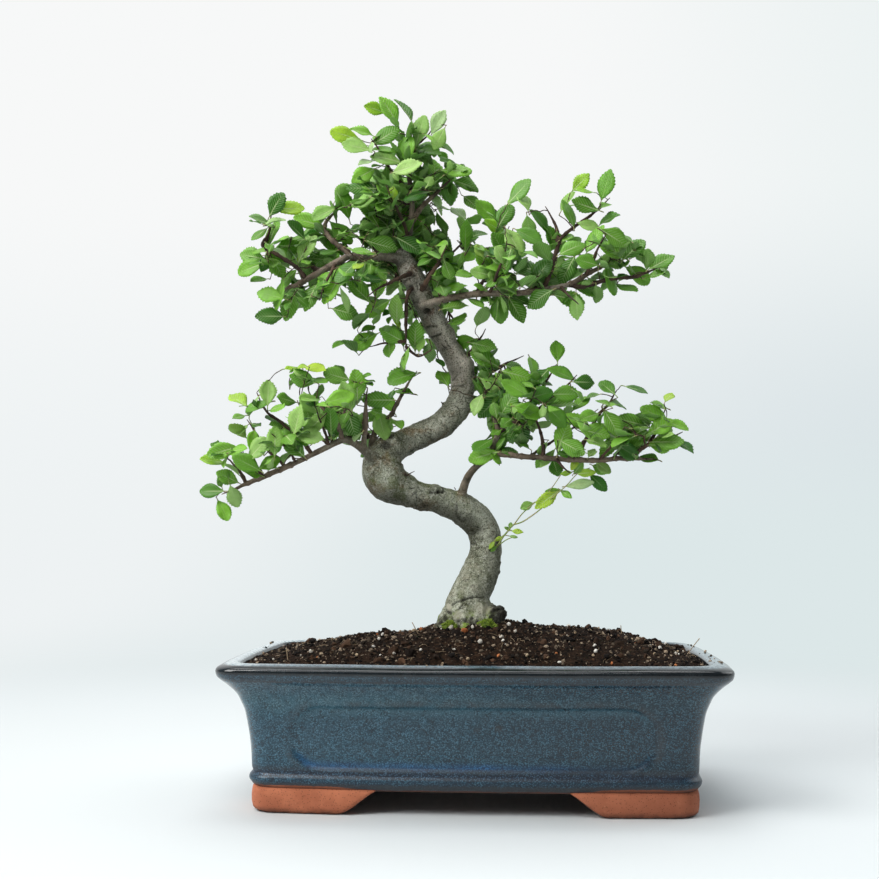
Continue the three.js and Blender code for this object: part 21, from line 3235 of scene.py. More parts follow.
        (20.2, -7, 331.5, 18.9, -5.4, 332.2, -0.64, 0.76, 0.14, -0.15, -0.3, 0.94, 18.9, 9.5, 3, 0),
        (23.6, -4.7, 321.2, 24, -2.7, 321.4, 0.19, 0.98, -0.12, 0.27, 0.07, 0.96, 16.1, 9.2, 0, 0),
        (5.5, -8.1, 350.1, 6, -9.8, 349.6, 0.25, -0.87, -0.42, 0.14, -0.4, 0.91, 16, 7.7, 0, 0),
        (38.8, 6.6, 316.8, 37.2, 5.5, 317.2, -0.81, -0.58, -0.03, -0.36, 0.47, 0.81, 15.2, 8.8, 0, 0),
        (23.5, -17.5, 342.5, 23.3, -16.8, 344.8, -0.1, 0.32, 0.94, 0.06, -0.94, 0.33, 15, 8.4, 0, 0),
        (43.9, -20.7, 332.4, 43.7, -18.7, 332.3, -0.06, 0.97, -0.23, -0.16, 0.22, 0.96, 13.9, 7.2, 0, 0),
        (22.1, -17.7, 348.9, 22, -19.7, 349, -0.01, -0.99, -0.17, 0.02, -0.17, 0.99, 13.7, 7.9, 0, 0),
        (13.5, -31.7, 320.2, 15.1, -32.7, 320, 0.81, -0.5, -0.31, 0.11, -0.39, 0.91, 15.2, 7.5, 3, 0),
        (21.4, -26.2, 331.8, 20.2, -24.8, 332.9, -0.6, 0.72, 0.35, 0.66, 0.2, 0.72, 14.4, 7.6, 0, 0),
        (35.8, -5.6, 320.2, 34.8, -3.9, 320.7, -0.49, 0.87, 0.04, -0.04, -0.07, 1, 16.6, 8.1, 0, 0),
        (22.9, -12.9, 345.5, 23.5, -10.9, 345.9, 0.27, 0.96, 0.01, -0.12, 0.02, 0.99, 13.3, 6.4, 3, 0),
        (26.8, -40.3, 325.5, 27.5, -42, 326.7, 0.37, -0.84, 0.39, -0.42, 0.22, 0.88, 15.5, 8.6, 0, 0),
        (29.2, -21.2, 344.2, 29.4, -23.2, 344.3, 0.1, -0.98, -0.16, 0.24, -0.13, 0.96, 14.8, 8.2, 0, 0),
        (29.1, -47.6, 315, 30, -49.3, 316, 0.45, -0.84, 0.29, -0.24, 0.2, 0.95, 16.5, 9.2, 0, 0),
        (42.3, -4.4, 330.9, 40.6, -3.6, 332.2, -0.81, 0.38, 0.44, 0.55, 0.24, 0.8, 17.6, 9.8, 0, 0),
        (9.8, 2.3, 338.2, 11.3, 1.4, 337, 0.72, -0.42, -0.56, 0.4, -0.41, 0.82, 8.8, 4.8, 0, 2),
        (22.3, -19.4, 352.1, 23.2, -19.2, 353.2, 0.63, 0.14, 0.77, -0.67, -0.4, 0.62, 10.7, 5.1, 0, 2),
        (18.4, -27.2, 329.8, 19.1, -25.9, 328.9, 0.41, 0.74, -0.53, -0.13, 0.62, 0.77, 11.6, 6.5, 0, 2),
        (23.9, -23.2, 318.5, 22.9, -21.7, 318.8, -0.55, 0.82, 0.15, -0.39, -0.41, 0.83, 6.7, 3.4, 0, 2),
        (24.9, -6, 317.2, 25.5, -4.4, 317.4, 0.35, 0.93, 0.11, 0.15, -0.17, 0.97, 9.4, 5, 0, 2),
        (12.5, -31.1, 322.2, 13.8, -30.7, 323.2, 0.76, 0.27, 0.59, -0.55, -0.24, 0.8, 9.2, 5.6, 0, 2),
        (16.2, -23.3, 320, 16.7, -22.2, 320.6, 0.42, 0.8, 0.43, 0.02, -0.48, 0.88, 12.4, 6.3, 0, 2),
        (22.3, -16.6, 348.1, 22.7, -17.7, 347.7, 0.36, -0.86, -0.37, 0.39, -0.22, 0.89, 7.9, 4.6, 1, 2),
        (17.5, -25.1, 318, 18.8, -26.1, 317.5, 0.77, -0.58, -0.28, -0.19, -0.63, 0.75, 8.9, 4.4, 3, 2),
        (24.1, -46.4, 343.4, 25, -45.8, 342.2, 0.52, 0.4, -0.76, 0.86, -0.24, 0.45, 11.9, 6.7, 0, 2),
        (20.9, -6.5, 341, 19.9, -6.9, 342.6, -0.55, -0.21, 0.81, 0.76, 0.28, 0.59, 7.6, 4.2, 0, 2),
        (12.9, -26.5, 327.3, 13.7, -26.8, 328.9, 0.43, -0.18, 0.89, -0.74, 0.5, 0.46, 7.3, 3.6, 0, 2),
        (13.1, -31.5, 320.9, 14.1, -30.6, 320.3, 0.67, 0.65, -0.37, 0.26, 0.25, 0.93, 12.5, 6.2, 3, 2),
        (38.8, -23.4, 328.1, 37.9, -24.1, 328.3, -0.79, -0.58, 0.17, 0.14, 0.1, 0.99, 6.8, 3.4, 0, 2),
        (20.2, -38.1, 326.1, 20.4, -39.2, 325.7, 0.12, -0.92, -0.38, -0.21, -0.4, 0.89, 10.8, 5.6, 0, 2),
        (20.5, -46.6, 351.3, 21.3, -44.7, 351.4, 0.43, 0.9, 0.02, 0.43, -0.22, 0.88, 7.7, 4, 0, 2),
        (27, -39.3, 341.5, 25.7, -39, 341.1, -0.92, 0.23, -0.32, -0.24, 0.31, 0.92, 12.7, 7.3, 0, 2),
        (47.8, -25.7, 319.3, 47.4, -24.1, 318.7, -0.21, 0.91, -0.36, -0.79, 0.06, 0.61, 12.5, 7.7, 1, 2),
        (10.8, -23, 341.1, 11.8, -23.6, 340, 0.63, -0.35, -0.69, -0.31, -0.93, 0.2, 10, 4.8, 0, 2),
        (5.4, -20.9, 337.9, 6.1, -19.5, 338.1, 0.43, 0.89, 0.17, 0.7, -0.45, 0.56, 9.1, 4.5, 0, 2),
        (26.3, -42.8, 321.6, 26, -43.8, 320.8, -0.2, -0.77, -0.61, -0.68, -0.34, 0.65, 8.6, 5, 0, 2),
        (36.1, 6, 315.8, 37, 5.7, 317.3, 0.53, -0.15, 0.83, -0.82, -0.34, 0.46, 12.1, 5.8, 0, 2),
        (7.1, -21.9, 340.4, 6.4, -21.9, 341.5, -0.53, -0.01, 0.85, -0.23, 0.97, -0.13, 10.1, 6.1, 1, 2),
        (42.6, -23.2, 328.3, 41.9, -22.1, 328.8, -0.52, 0.78, 0.35, 0.16, -0.31, 0.94, 10.2, 5.8, 0, 2),
        (19.2, -8.4, 337, 19.7, -7, 337.5, 0.29, 0.92, 0.27, -0.71, 0.01, 0.71, 7.1, 3.8, 0, 2),
        (13.1, 7.1, 340.3, 13.5, 6.7, 338.7, 0.24, -0.25, -0.94, 0.22, -0.93, 0.3, 11.7, 6.8, 3, 2),
        (25.5, -16.8, 344.1, 23.8, -17.2, 344.7, -0.91, -0.21, 0.35, 0.38, -0.11, 0.92, 6.7, 3.6, 0, 2),
        (16.8, -34.4, 315.8, 17.1, -34, 314.5, 0.17, 0.28, -0.95, 0.82, 0.5, 0.29, 11.7, 6.2, 0, 2),
        (-2.9, -14.2, 353.1, -2, -16, 353.4, 0.46, -0.87, 0.19, -0.42, -0.03, 0.91, 9.6, 4.8, 0, 2),
        (21, -5.9, 342.5, 20.8, -4.3, 343.5, -0.1, 0.85, 0.52, -0.15, -0.53, 0.83, 9.1, 5.1, 0, 2),
        (7.4, -7.5, 329.6, 8.4, -7.3, 330.9, 0.63, 0.12, 0.76, -0.52, -0.67, 0.53, 10.1, 5.7, 0, 2),
        (22.7, -14.9, 315.1, 23.2, -15.9, 313.3, 0.22, -0.47, -0.85, 0.21, -0.83, 0.52, 8.1, 4.8, 0, 2),
        (18, -37.3, 326.1, 18.7, -37.9, 325, 0.5, -0.38, -0.78, 0.87, 0.24, 0.43, 7.9, 4.7, 0, 2),
        (13.6, -31.8, 320.1, 15.2, -32.4, 321.3, 0.77, -0.29, 0.57, -0.45, 0.38, 0.81, 10.9, 6.7, 0, 2),
        (44.2, -20.4, 332.3, 44.2, -22.4, 331.6, 0, -0.94, -0.34, 0.27, -0.33, 0.9, 11.5, 5.8, 0, 2),
        (27.3, -18.3, 344.5, 27.9, -18.1, 343.3, 0.44, 0.11, -0.89, 0.08, -0.99, -0.08, 11.8, 6.3, 0, 2),
        (25.2, -37.9, 344.7, 23.6, -38.4, 344.7, -0.96, -0.29, 0, 0.05, -0.18, 0.98, 12.3, 7.4, 0, 2),
        (24.3, -36.3, 346, 24.7, -35.3, 347.1, 0.29, 0.61, 0.73, -0.29, -0.67, 0.68, 8.6, 4.2, 0, 2),
        (16.4, -8.7, 334.5, 17, -9.4, 335.7, 0.41, -0.44, 0.8, -0.63, 0.5, 0.6, 11.8, 5.9, 0, 2),
        (14.3, -23.8, 317.9, 14.4, -21.9, 317.5, 0.08, 0.98, -0.18, 0.33, 0.14, 0.93, 12.2, 7.5, 0, 2),
        (19.2, -7.9, 333.5, 19.3, -8.9, 332, 0.04, -0.54, -0.84, 0.46, -0.73, 0.5, 8.8, 5.1, 0, 2),
        (16.3, -18.1, 316.6, 16.8, -16.9, 316.4, 0.4, 0.91, -0.12, 0.14, 0.07, 0.99, 10.8, 6.4, 0, 2),
        (19.6, -45.7, 335.7, 19.9, -44.2, 334.8, 0.18, 0.85, -0.5, -0.04, 0.51, 0.86, 10.4, 5.6, 0, 2),
        (9.6, 2.3, 338, 10.4, 3.6, 337.7, 0.49, 0.84, -0.23, 0.23, 0.13, 0.96, 6.9, 4, 3, 2),
        (22.1, -18.1, 349.6, 21.3, -19.2, 349.3, -0.58, -0.78, -0.23, -0.05, -0.25, 0.97, 12.7, 7.4, 0, 2),
        (39.2, -18.9, 322.8, 38.4, -18, 323.5, -0.54, 0.64, 0.55, 0.22, -0.53, 0.82, 7.9, 4.7, 0, 2),
        (23.9, -4.9, 320.3, 24.5, -6.3, 321.7, 0.32, -0.65, 0.69, -0.89, 0.04, 0.45, 7.8, 4.6, 3, 2),
        (17.5, -7.6, 351.5, 17.9, -8.6, 352.2, 0.29, -0.78, 0.55, 0.94, 0.33, -0.02, 12.4, 6, 0, 2),
        (42.3, -20.3, 324.2, 42.7, -20.2, 325.6, 0.26, 0.1, 0.96, -0.84, -0.46, 0.28, 7.6, 4.1, 3, 2),
        (1.9, -20.7, 330.2, 3.1, -20.2, 330.9, 0.82, 0.32, 0.48, -0.43, -0.21, 0.88, 8.7, 5.3, 0, 2),
        (12.6, -30.9, 322.6, 12.3, -31.1, 324.1, -0.25, -0.13, 0.96, 0.26, -0.96, -0.07, 7.1, 4.4, 0, 2),
        (20.7, -7.2, 339.9, 21.4, -5.3, 340.2, 0.34, 0.93, 0.12, -0.18, -0.06, 0.98, 12.2, 6.4, 0, 2),
        (13, -27.2, 326.8, 12, -26.8, 327.7, -0.74, 0.28, 0.61, 0.5, -0.38, 0.78, 7.7, 4, 0, 2),
        (44.1, -12, 326.1, 43.6, -12.5, 324.4, -0.28, -0.25, -0.93, 0.14, -0.97, 0.21, 7.7, 4.5, 0, 2),
        (16.1, -19.6, 316.5, 17.8, -19.2, 316.2, 0.95, 0.22, -0.2, 0.26, -0.28, 0.92, 11.9, 6.6, 0, 2),
        (27.1, -38.7, 341.2, 27.5, -38.1, 343, 0.21, 0.33, 0.92, -0.3, -0.87, 0.38, 7.2, 4.4, 0, 2),
    ]),
    ("shoot_right_upper_5", [
        (49.1, -23.1, 316.3, 51, -23.4, 316.2, 0.96, -0.11, -0.27, -0.09, -0.99, 0.1, 21.5, 10.6, 0, 1),
        (52.3, -36.2, 317.8, 50.6, -35.8, 317.3, -0.86, 0.18, -0.47, -0.37, -0.87, 0.33, 21.3, 12.6, 0, 1),
        (65.9, -17.1, 344, 65, -17.4, 342.7, -0.48, -0.16, -0.86, -0.13, -0.96, 0.25, 21.7, 11.2, 0, 1),
        (59.5, -22.2, 321.5, 61.4, -21.7, 321.9, 0.97, 0.26, 0.02, 0.22, -0.85, 0.47, 21.6, 12.6, 0, 1),
        (52.6, -33.2, 338.7, 54.3, -32.8, 340.1, 0.84, 0.21, 0.5, -0.02, -0.91, 0.41, 21.4, 11.8, 0, 1),
        (80.8, -33.8, 331.6, 78.9, -34.3, 332.4, -0.93, -0.28, 0.24, 0.29, -0.96, 0, 15.7, 9.3, 0, 1),
        (65.1, -26.3, 317.1, 65.1, -27, 315.6, 0.02, -0.35, -0.94, -0.27, -0.91, 0.33, 19.9, 9.5, 3, 1),
        (50.2, -3.8, 323, 50.8, -4.3, 325.2, 0.27, -0.26, 0.93, -0.55, -0.83, -0.07, 22, 10.6, 0, 1),
        (85.8, -18.4, 325.7, 84.5, -17.2, 327, -0.67, 0.61, 0.42, -0.28, -0.73, 0.62, 13.4, 6.4, 0, 1),
        (77.6, -26.6, 323, 77.8, -25.1, 322.1, 0.14, 0.76, -0.64, 0.48, 0.52, 0.71, 13.3, 7.7, 0, 1),
        (74, -17.9, 335.7, 72.7, -16.6, 335.5, -0.67, 0.67, -0.3, -0.12, 0.31, 0.94, 16.2, 8.6, 0, 1),
        (79.7, -21.2, 342.9, 78.6, -22.6, 342.4, -0.58, -0.7, -0.42, 0.07, -0.56, 0.83, 13.2, 7.1, 0, 1),
        (42.6, -20.5, 324.4, 44, -19, 324.9, 0.68, 0.73, 0.06, 0.44, -0.46, 0.77, 10.7, 5.3, 0, 1),
        (67.8, -27.8, 341.9, 67.3, -26.4, 341.1, -0.24, 0.73, -0.64, -0.73, 0.3, 0.61, 10.6, 5.6, 0, 1),
        (79.1, -26.5, 330, 79.2, -28, 331.8, 0.05, -0.75, 0.66, -0.89, 0.27, 0.36, 10.5, 6.2, 0, 1),
        (68.4, -26.6, 327.9, 69.2, -25.1, 329.4, 0.39, 0.75, 0.54, -0.33, -0.43, 0.84, 19.3, 9.4, 0, 0),
        (45.7, -19.5, 313.8, 45.2, -21.1, 315.4, -0.22, -0.78, 0.58, 0.91, 0.05, 0.42, 14.6, 7.8, 0, 0),
        (52.8, -14.8, 329.8, 52.6, -12.8, 330.2, -0.1, 0.99, -0.03, -0.44, -0.02, 0.9, 15.3, 8.3, 0, 0),
        (43.3, -0.7, 329.3, 44.5, 0.7, 329.1, 0.63, 0.71, -0.32, -0.16, 0.52, 0.84, 16, 8.5, 0, 0),
        (60.7, -3.1, 334, 59.4, -3, 332.9, -0.66, 0.06, -0.75, -0.36, 0.85, 0.38, 12.6, 7.2, 0, 0),
        (66.8, -26.2, 311.8, 64.9, -25.9, 312.8, -0.93, 0.19, 0.3, 0.34, 0.25, 0.91, 17.9, 8.7, 0, 0),
        (46, -14.8, 328.7, 47.2, -13.4, 328.4, 0.61, 0.72, -0.33, -0.2, 0.54, 0.82, 19.1, 11.3, 3, 0),
        (52.3, -21.7, 334.5, 51, -20.3, 335.5, -0.65, 0.7, 0.29, 0, -0.38, 0.93, 18.6, 9.6, 0, 0),
        (84.2, -17.5, 338.3, 83, -16.5, 338.6, -0.76, 0.63, 0.18, 0.07, -0.2, 0.98, 9.8, 6, 0, 2),
        (80.6, -21.2, 325.3, 79, -21.7, 325.5, -0.96, -0.28, 0.08, 0.12, -0.1, 0.99, 6.7, 3.6, 0, 2),
        (65.1, -26.3, 317, 63.7, -26.3, 316, -0.81, 0, -0.59, -0.55, -0.34, 0.76, 9.7, 4.8, 0, 2),
        (44.6, -12.1, 325.9, 45.1, -11.2, 325.1, 0.4, 0.7, -0.59, 0.5, 0.38, 0.78, 9.6, 4.8, 0, 2),
        (76.9, -24.6, 323.2, 75.3, -25.4, 323, -0.9, -0.43, -0.08, -0.32, 0.53, 0.79, 7.5, 4.1, 3, 2),
        (75.8, -28.7, 335.7, 77.8, -28.5, 335.6, 0.99, 0.08, -0.07, 0.07, 0.05, 1, 8.4, 4.4, 0, 2),
        (74.6, -18.4, 335.1, 74.5, -17.1, 336, -0.04, 0.82, 0.57, 0, -0.57, 0.82, 9.2, 5.4, 0, 2),
        (79.4, -32.5, 332.7, 79.8, -33.7, 332.5, 0.31, -0.94, -0.16, 0.77, 0.15, 0.62, 12.5, 6.3, 0, 2),
        (47.4, -21.5, 316, 48.1, -20.3, 316.5, 0.45, 0.84, 0.31, -0.09, -0.3, 0.95, 13, 7.7, 3, 2),
        (48.5, 6.6, 336.4, 46.8, 7.1, 335.5, -0.87, 0.24, -0.44, -0.44, 0.04, 0.9, 12.4, 6.5, 0, 2),
        (70.1, -31.2, 344, 70, -29.3, 344.8, -0.08, 0.92, 0.39, -0.37, -0.39, 0.85, 10.9, 5.6, 3, 2),
        (51.2, -21, 334.3, 52.4, -20.6, 334.4, 0.94, 0.33, 0.08, 0.12, -0.54, 0.83, 8.3, 4.7, 0, 2),
        (49.4, -19.7, 331.9, 50.4, -19.1, 331.5, 0.81, 0.49, -0.31, 0.42, -0.14, 0.9, 6.8, 3.5, 0, 2),
        (49.4, -22.1, 331.8, 51.1, -22.7, 331.8, 0.94, -0.33, 0, -0.03, -0.1, 0.99, 7.6, 4.5, 0, 2),
    ]),
    ("shoot_right_upper_6", [
        (16.1, -23.2, 320.3, 16.1, -22.7, 318.7, -0.02, 0.28, -0.96, -0.45, -0.86, -0.24, 21.7, 12.3, 0, 1),
        (0.2, -7.5, 297.1, 1, -8.9, 298.7, 0.41, -0.71, 0.57, -0.36, 0.44, 0.82, 18.8, 11.1, 0, 1),
        (-22.9, -25.2, 317.8, -21.1, -24.7, 318.7, 0.92, 0.28, 0.27, 0, -0.69, 0.72, 18.9, 11.3, 0, 1),
        (-19.5, -3.9, 301.1, -18, -5.2, 301.8, 0.74, -0.65, 0.13, -0.62, -0.6, 0.5, 18.9, 9.6, 0, 1),
        (-22.9, -25.9, 306.5, -21, -25.4, 307.4, 0.93, 0.24, 0.27, -0.04, -0.68, 0.74, 18.7, 8.9, 0, 1),
        (12.9, -26.2, 327.5, 11, -26.8, 328.4, -0.93, -0.28, 0.24, 0.29, -0.96, 0, 13.7, 8.1, 0, 1),
        (1.8, -20.7, 329.8, 0.4, -22.2, 330.1, -0.68, -0.73, -0.06, 0.49, -0.51, 0.71, 15.9, 8.7, 0, 1),
        (-6.1, -18.2, 315.9, -4.7, -19.4, 315.5, 0.67, -0.61, -0.42, 0.11, -0.48, 0.87, 15.9, 8.2, 0, 1),
        (8.7, -21.8, 319.9, 7.4, -23.3, 320.6, -0.65, -0.75, 0.13, 0.75, -0.6, 0.29, 10.6, 5.4, 0, 1),
        (14.6, -14.6, 316.4, 13.2, -16.1, 316.3, -0.65, -0.72, -0.24, 0.23, -0.5, 0.84, 13.3, 6.4, 0, 1),
        (-21, -6.3, 323.6, -19.9, -7.7, 325, 0.56, -0.69, 0.45, -0.16, 0.45, 0.88, 13.5, 6.7, 0, 1),
        (12.8, -14.8, 324.8, 11.4, -13.5, 324.9, -0.74, 0.65, -0.13, -0.59, -0.55, 0.59, 10.8, 6.1, 0, 1),
        (-19.3, -12.2, 315.8, -20.5, -13.7, 316.8, -0.58, -0.76, 0.3, 0.1, 0.3, 0.95, 10.7, 6, 0, 1),
        (-16.2, -11.2, 304, -15.6, -9.7, 303.2, 0.31, 0.76, -0.57, 0.45, 0.41, 0.79, 10.9, 5.2, 0, 1),
        (9.9, -19.2, 318.8, 10, -20.4, 317.6, 0.04, -0.63, -0.78, 0.83, -0.41, 0.38, 10.6, 5.1, 0, 1),
        (-21.2, -22.4, 312.2, -20.3, -20.9, 311.7, 0.46, 0.76, -0.45, 0.3, 0.35, 0.89, 10.7, 5.6, 0, 1),
        (-24.4, -14.4, 327.6, -24.4, -16.4, 328, -0.01, -1, 0, 0.18, 0, 0.98, 13.5, 7.6, 0, 0),
        (-11.9, -3.4, 336.6, -11.5, -5.4, 336.9, 0.23, -0.97, -0.02, 0.28, 0.04, 0.96, 13.1, 6.6, 0, 0),
        (-19.9, -16.1, 337.6, -20.5, -17.7, 338.9, -0.28, -0.85, 0.45, 0.19, 0.41, 0.89, 13.5, 7.5, 0, 0),
        (-26.7, -30.4, 344.2, -27.2, -32.3, 344.1, -0.28, -0.93, -0.25, -0.21, -0.2, 0.96, 14, 7.6, 0, 0),
        (-23.1, -6.7, 335.4, -21.3, -7.6, 335.4, 0.86, -0.47, -0.2, 0.13, -0.19, 0.97, 15.5, 8.9, 0, 0),
        (13.5, -29.9, 324.8, 13.1, -31.6, 324.2, -0.16, -0.85, -0.51, -0.21, -0.47, 0.86, 14.7, 7.4, 0, 0),
        (1.6, -24.1, 313.9, 1.8, -22.5, 315.5, 0.12, 0.79, 0.6, -0.11, -0.59, 0.8, 13.2, 7.2, 0, 0),
        (-32.3, -42.7, 341.4, -31, -44, 341.1, 0.68, -0.65, -0.34, 0.08, -0.4, 0.91, 16.1, 8.1, 0, 0),
        (-9.2, -18.9, 321.4, -8.7, -17.1, 321.2, 0.26, 0.93, -0.27, -0.01, 0.28, 0.96, 12.8, 7.5, 0, 0),
        (-18.1, -17.1, 314.8, -17.1, -15.4, 315.1, 0.48, 0.88, -0.02, 0.43, -0.22, 0.88, 14.4, 7.1, 0, 0),
        (8.1, -29.1, 319.9, 8, -27.2, 319.5, -0.04, 0.92, -0.38, -0.24, 0.36, 0.9, 13.4, 7.1, 0, 0),
        (-19.8, -32.6, 339.7, -19.1, -32.6, 338.2, 0.35, -0.01, -0.94, 0.37, -0.92, 0.15, 14.8, 8.2, 0, 0),
        (-21.9, -24.9, 322.7, -21.5, -26.6, 322.3, 0.21, -0.89, -0.41, -0.03, -0.43, 0.9, 17.6, 9.8, 0, 0),
        (14.9, -20.8, 316.3, 14.9, -21.4, 314.8, -0.01, -0.31, -0.95, -0.97, -0.23, 0.09, 16, 7.8, 0, 0),
        (-16.5, -10.6, 321.8, -16.4, -12.4, 323, 0.06, -0.93, 0.36, -0.06, 0.36, 0.93, 13.2, 7.9, 0, 0),
        (-25.6, -23.6, 349, -24.4, -25.2, 349.2, 0.58, -0.81, -0.11, -0.41, -0.4, 0.82, 12.8, 7.4, 0, 0),
        (-26.8, -38.6, 339.3, -27.8, -37.4, 339.5, -0.63, 0.77, 0.1, -0.4, -0.44, 0.8, 12.2, 6, 0, 2),
        (-17.2, -10.8, 320.5, -17.6, -10.5, 321.9, -0.29, 0.22, 0.93, 0.62, -0.7, 0.36, 12, 5.8, 0, 2),
        (-30.6, -41.1, 340.8, -30.7, -42.6, 341.2, -0.06, -0.96, 0.27, 0.19, 0.25, 0.95, 9.6, 5.3, 0, 2),
        (-21.2, -35, 337.4, -20.7, -35.8, 339.2, 0.25, -0.42, 0.87, -0.7, -0.7, -0.13, 7.9, 4.9, 3, 2),
        (12.9, -15.5, 324.2, 11.8, -15.4, 325.6, -0.63, 0.07, 0.77, 0.24, -0.93, 0.28, 7.7, 4.3, 0, 2),
        (-26.6, -27, 347, -26.1, -26, 346.4, 0.36, 0.81, -0.46, -0.81, 0.03, -0.58, 6.5, 3.5, 0, 2),
        (-24.6, -37.9, 338.4, -25.9, -38.8, 337.4, -0.72, -0.5, -0.49, -0.14, -0.58, 0.8, 11.9, 6.3, 0, 2),
        (-25.8, -17, 328, -26, -16.3, 329.6, -0.11, 0.39, 0.91, -0.52, -0.81, 0.28, 7, 3.9, 0, 2),
    ]),
]

# Creases in the bark: line, half width, height (less than 0 sinks), shade (1 dark, -1 pale).
CREASES = [([(-14.8, -13.6, 118.6), (-12.4, -11.6, 120.6), (-8, -13.1, 121.4), (-3.8, -13.1, 123.2), (-1, -12.6, 123.9), (3.3, -11.8, 123.2), (7.4, -9.3, 122.7), (9.8, -6.1, 123.4)], 0.73, -0.7, 0.85), ([(-8.7, -6, 133.9), (-4.3, -8.2, 135)], 0.45, -0.3, 0.6), ([(-2.1, 0.9, 160.7), (3.1, -2.1, 160.7), (7.4, -2.2, 161.1), (11.7, 0, 164.3)], 0.78, -0.35, 0.35), ([(-11.6, -12.6, 182.6), (-12, -9.9, 176.4), (-10.4, -7.2, 172.9), (-8, -5, 171.5), (-6.2, -6.5, 172.9)], 0.96, -0.7, 0.6), ([(-42.3, -21.3, 182.2), (-37.5, -23.5, 187.4)], 0.45, 0.2, -0.6), ([(-36.5, -23.1, 193.6), (-37.1, -24.4, 190.2), (-35.5, -22.4, 186), (-33.1, -19.5, 182.9), (-32, -17.6, 180.4)], 0.7, -0.4, 0.45), ([(-41.2, -26.1, 192.8), (-38.7, -24.9, 192.8)], 0.57, -0.4, 0.8), ([(-34.4, -4.9, 229.5), (-29.5, -2.1, 226.4), (-28.2, 1, 224.2)], 0.65, -0.4, 0.5), ([(-17.2, 13.4, 260.9), (-15.9, 11.5, 262.3), (-13.6, 9.5, 262.5), (-8.7, 8.2, 262.3), (-4.8, 28, 263.3), (-1.6, 16, 261.4)], 0.74, -0.6, 0.75), ([(-16.1, 11.6, 266.3), (-12.6, 7.5, 269.2)], 0.6, -0.4, 0.65), ([(-29.3, 1.1, 294.1), (-26, -1.2, 294.4), (-22.9, -2.3, 295.3)], 0.86, -0.6, 0.92), ([(-31.9, -2.4, 300.2), (-29.2, -3.6, 300.3), (-25.6, -4.5, 300.7)], 0.79, -0.5, 0.8), ([(-40, -7.3, 317), (-30.9, -8.1, 322.9)], 0.46, 0.35, -0.75), ([(-39.6, -6.7, 315.9), (-30.5, -8.2, 321.8)], 0.46, -0.3, 0.5), ([(-16, 1.3, 289.6), (-13.3, 3.7, 290.4)], 0.86, -0.4, 0.5), ([(-46.7, -8.5, 329.3), (-43, -12.3, 330.4), (-38.4, -12.5, 333)], 0.66, -0.4, 0.6), ([(-64.7, -29.8, 201.6), (-62.2, -29.2, 204.8), (-59.6, -29.9, 206)], 0.57, -0.3, 0.4), ([(-28.6, -19.1, 190), (-25, -16.8, 189.9), (-20.6, -14.2, 190.1)], 0.7, -0.7, 0.95), ([(-17.9, -6.9, 121.5), (-16.1, -15.8, 114.3)], 0.64, -0.3, 0.4), ([(15.6, 3.8, 157.4), (13, -0.3, 152.2)], 0.52, -0.2, 0.5), ([(-62.7, -25.8, 213.3), (-57.4, -27, 211.3), (-51.8, -25.3, 209.5), (-47.4, -24.8, 208.2)], 0.89, -0.4, 0.45), ([(-70.1, -22.6, 209.7), (-65.7, -26.7, 207.5), (-61, -28.6, 208.6)], 0.77, -0.4, 0.4), ([(-56.2, -25.8, 185.3), (-49.8, -25.1, 184.6), (-45, -22.8, 183.4)], 0.89, 0, 0.3), ([(-3.9, 0.6, 149.6), (1.4, -4, 147.7), (6.6, -3.8, 147.7)], 0.59, -0.25, 0.25)]

# Short dead spurs on the wood: line, radius.
SPURS = [([(-43.1, -26.1, 200.5), (-40.9, -26.1, 202), (-37.9, -26.1, 203.5)], 0.51), ([(-44, -26.6, 200.8), (-43.9, -26.6, 203.2)], 0.44), ([(-21.9, 12, 250.3), (-23.5, 12, 252)], 0.74), ([(-13.1, -4, 192.7), (-14, -4, 194.4)], 0.39), ([(11.1, 0.3, 169.4), (12.3, 0.3, 171)], 0.33), ([(15.3, -11, 114.8), (17.8, -11, 115.8)], 0.7), ([(10.1, -6, 122.1), (11.6, -6, 123.4)], 0.51), ([(15.5, -11, 212.7), (15.6, -11, 207.8)], 0.65), ([(-26.1, -9.8, 108.9), (-27, -9.8, 110.4)], 0.58), ([(-14.3, -12.6, 119.2), (-16.3, -12.6, 117.6)], 0.32)]

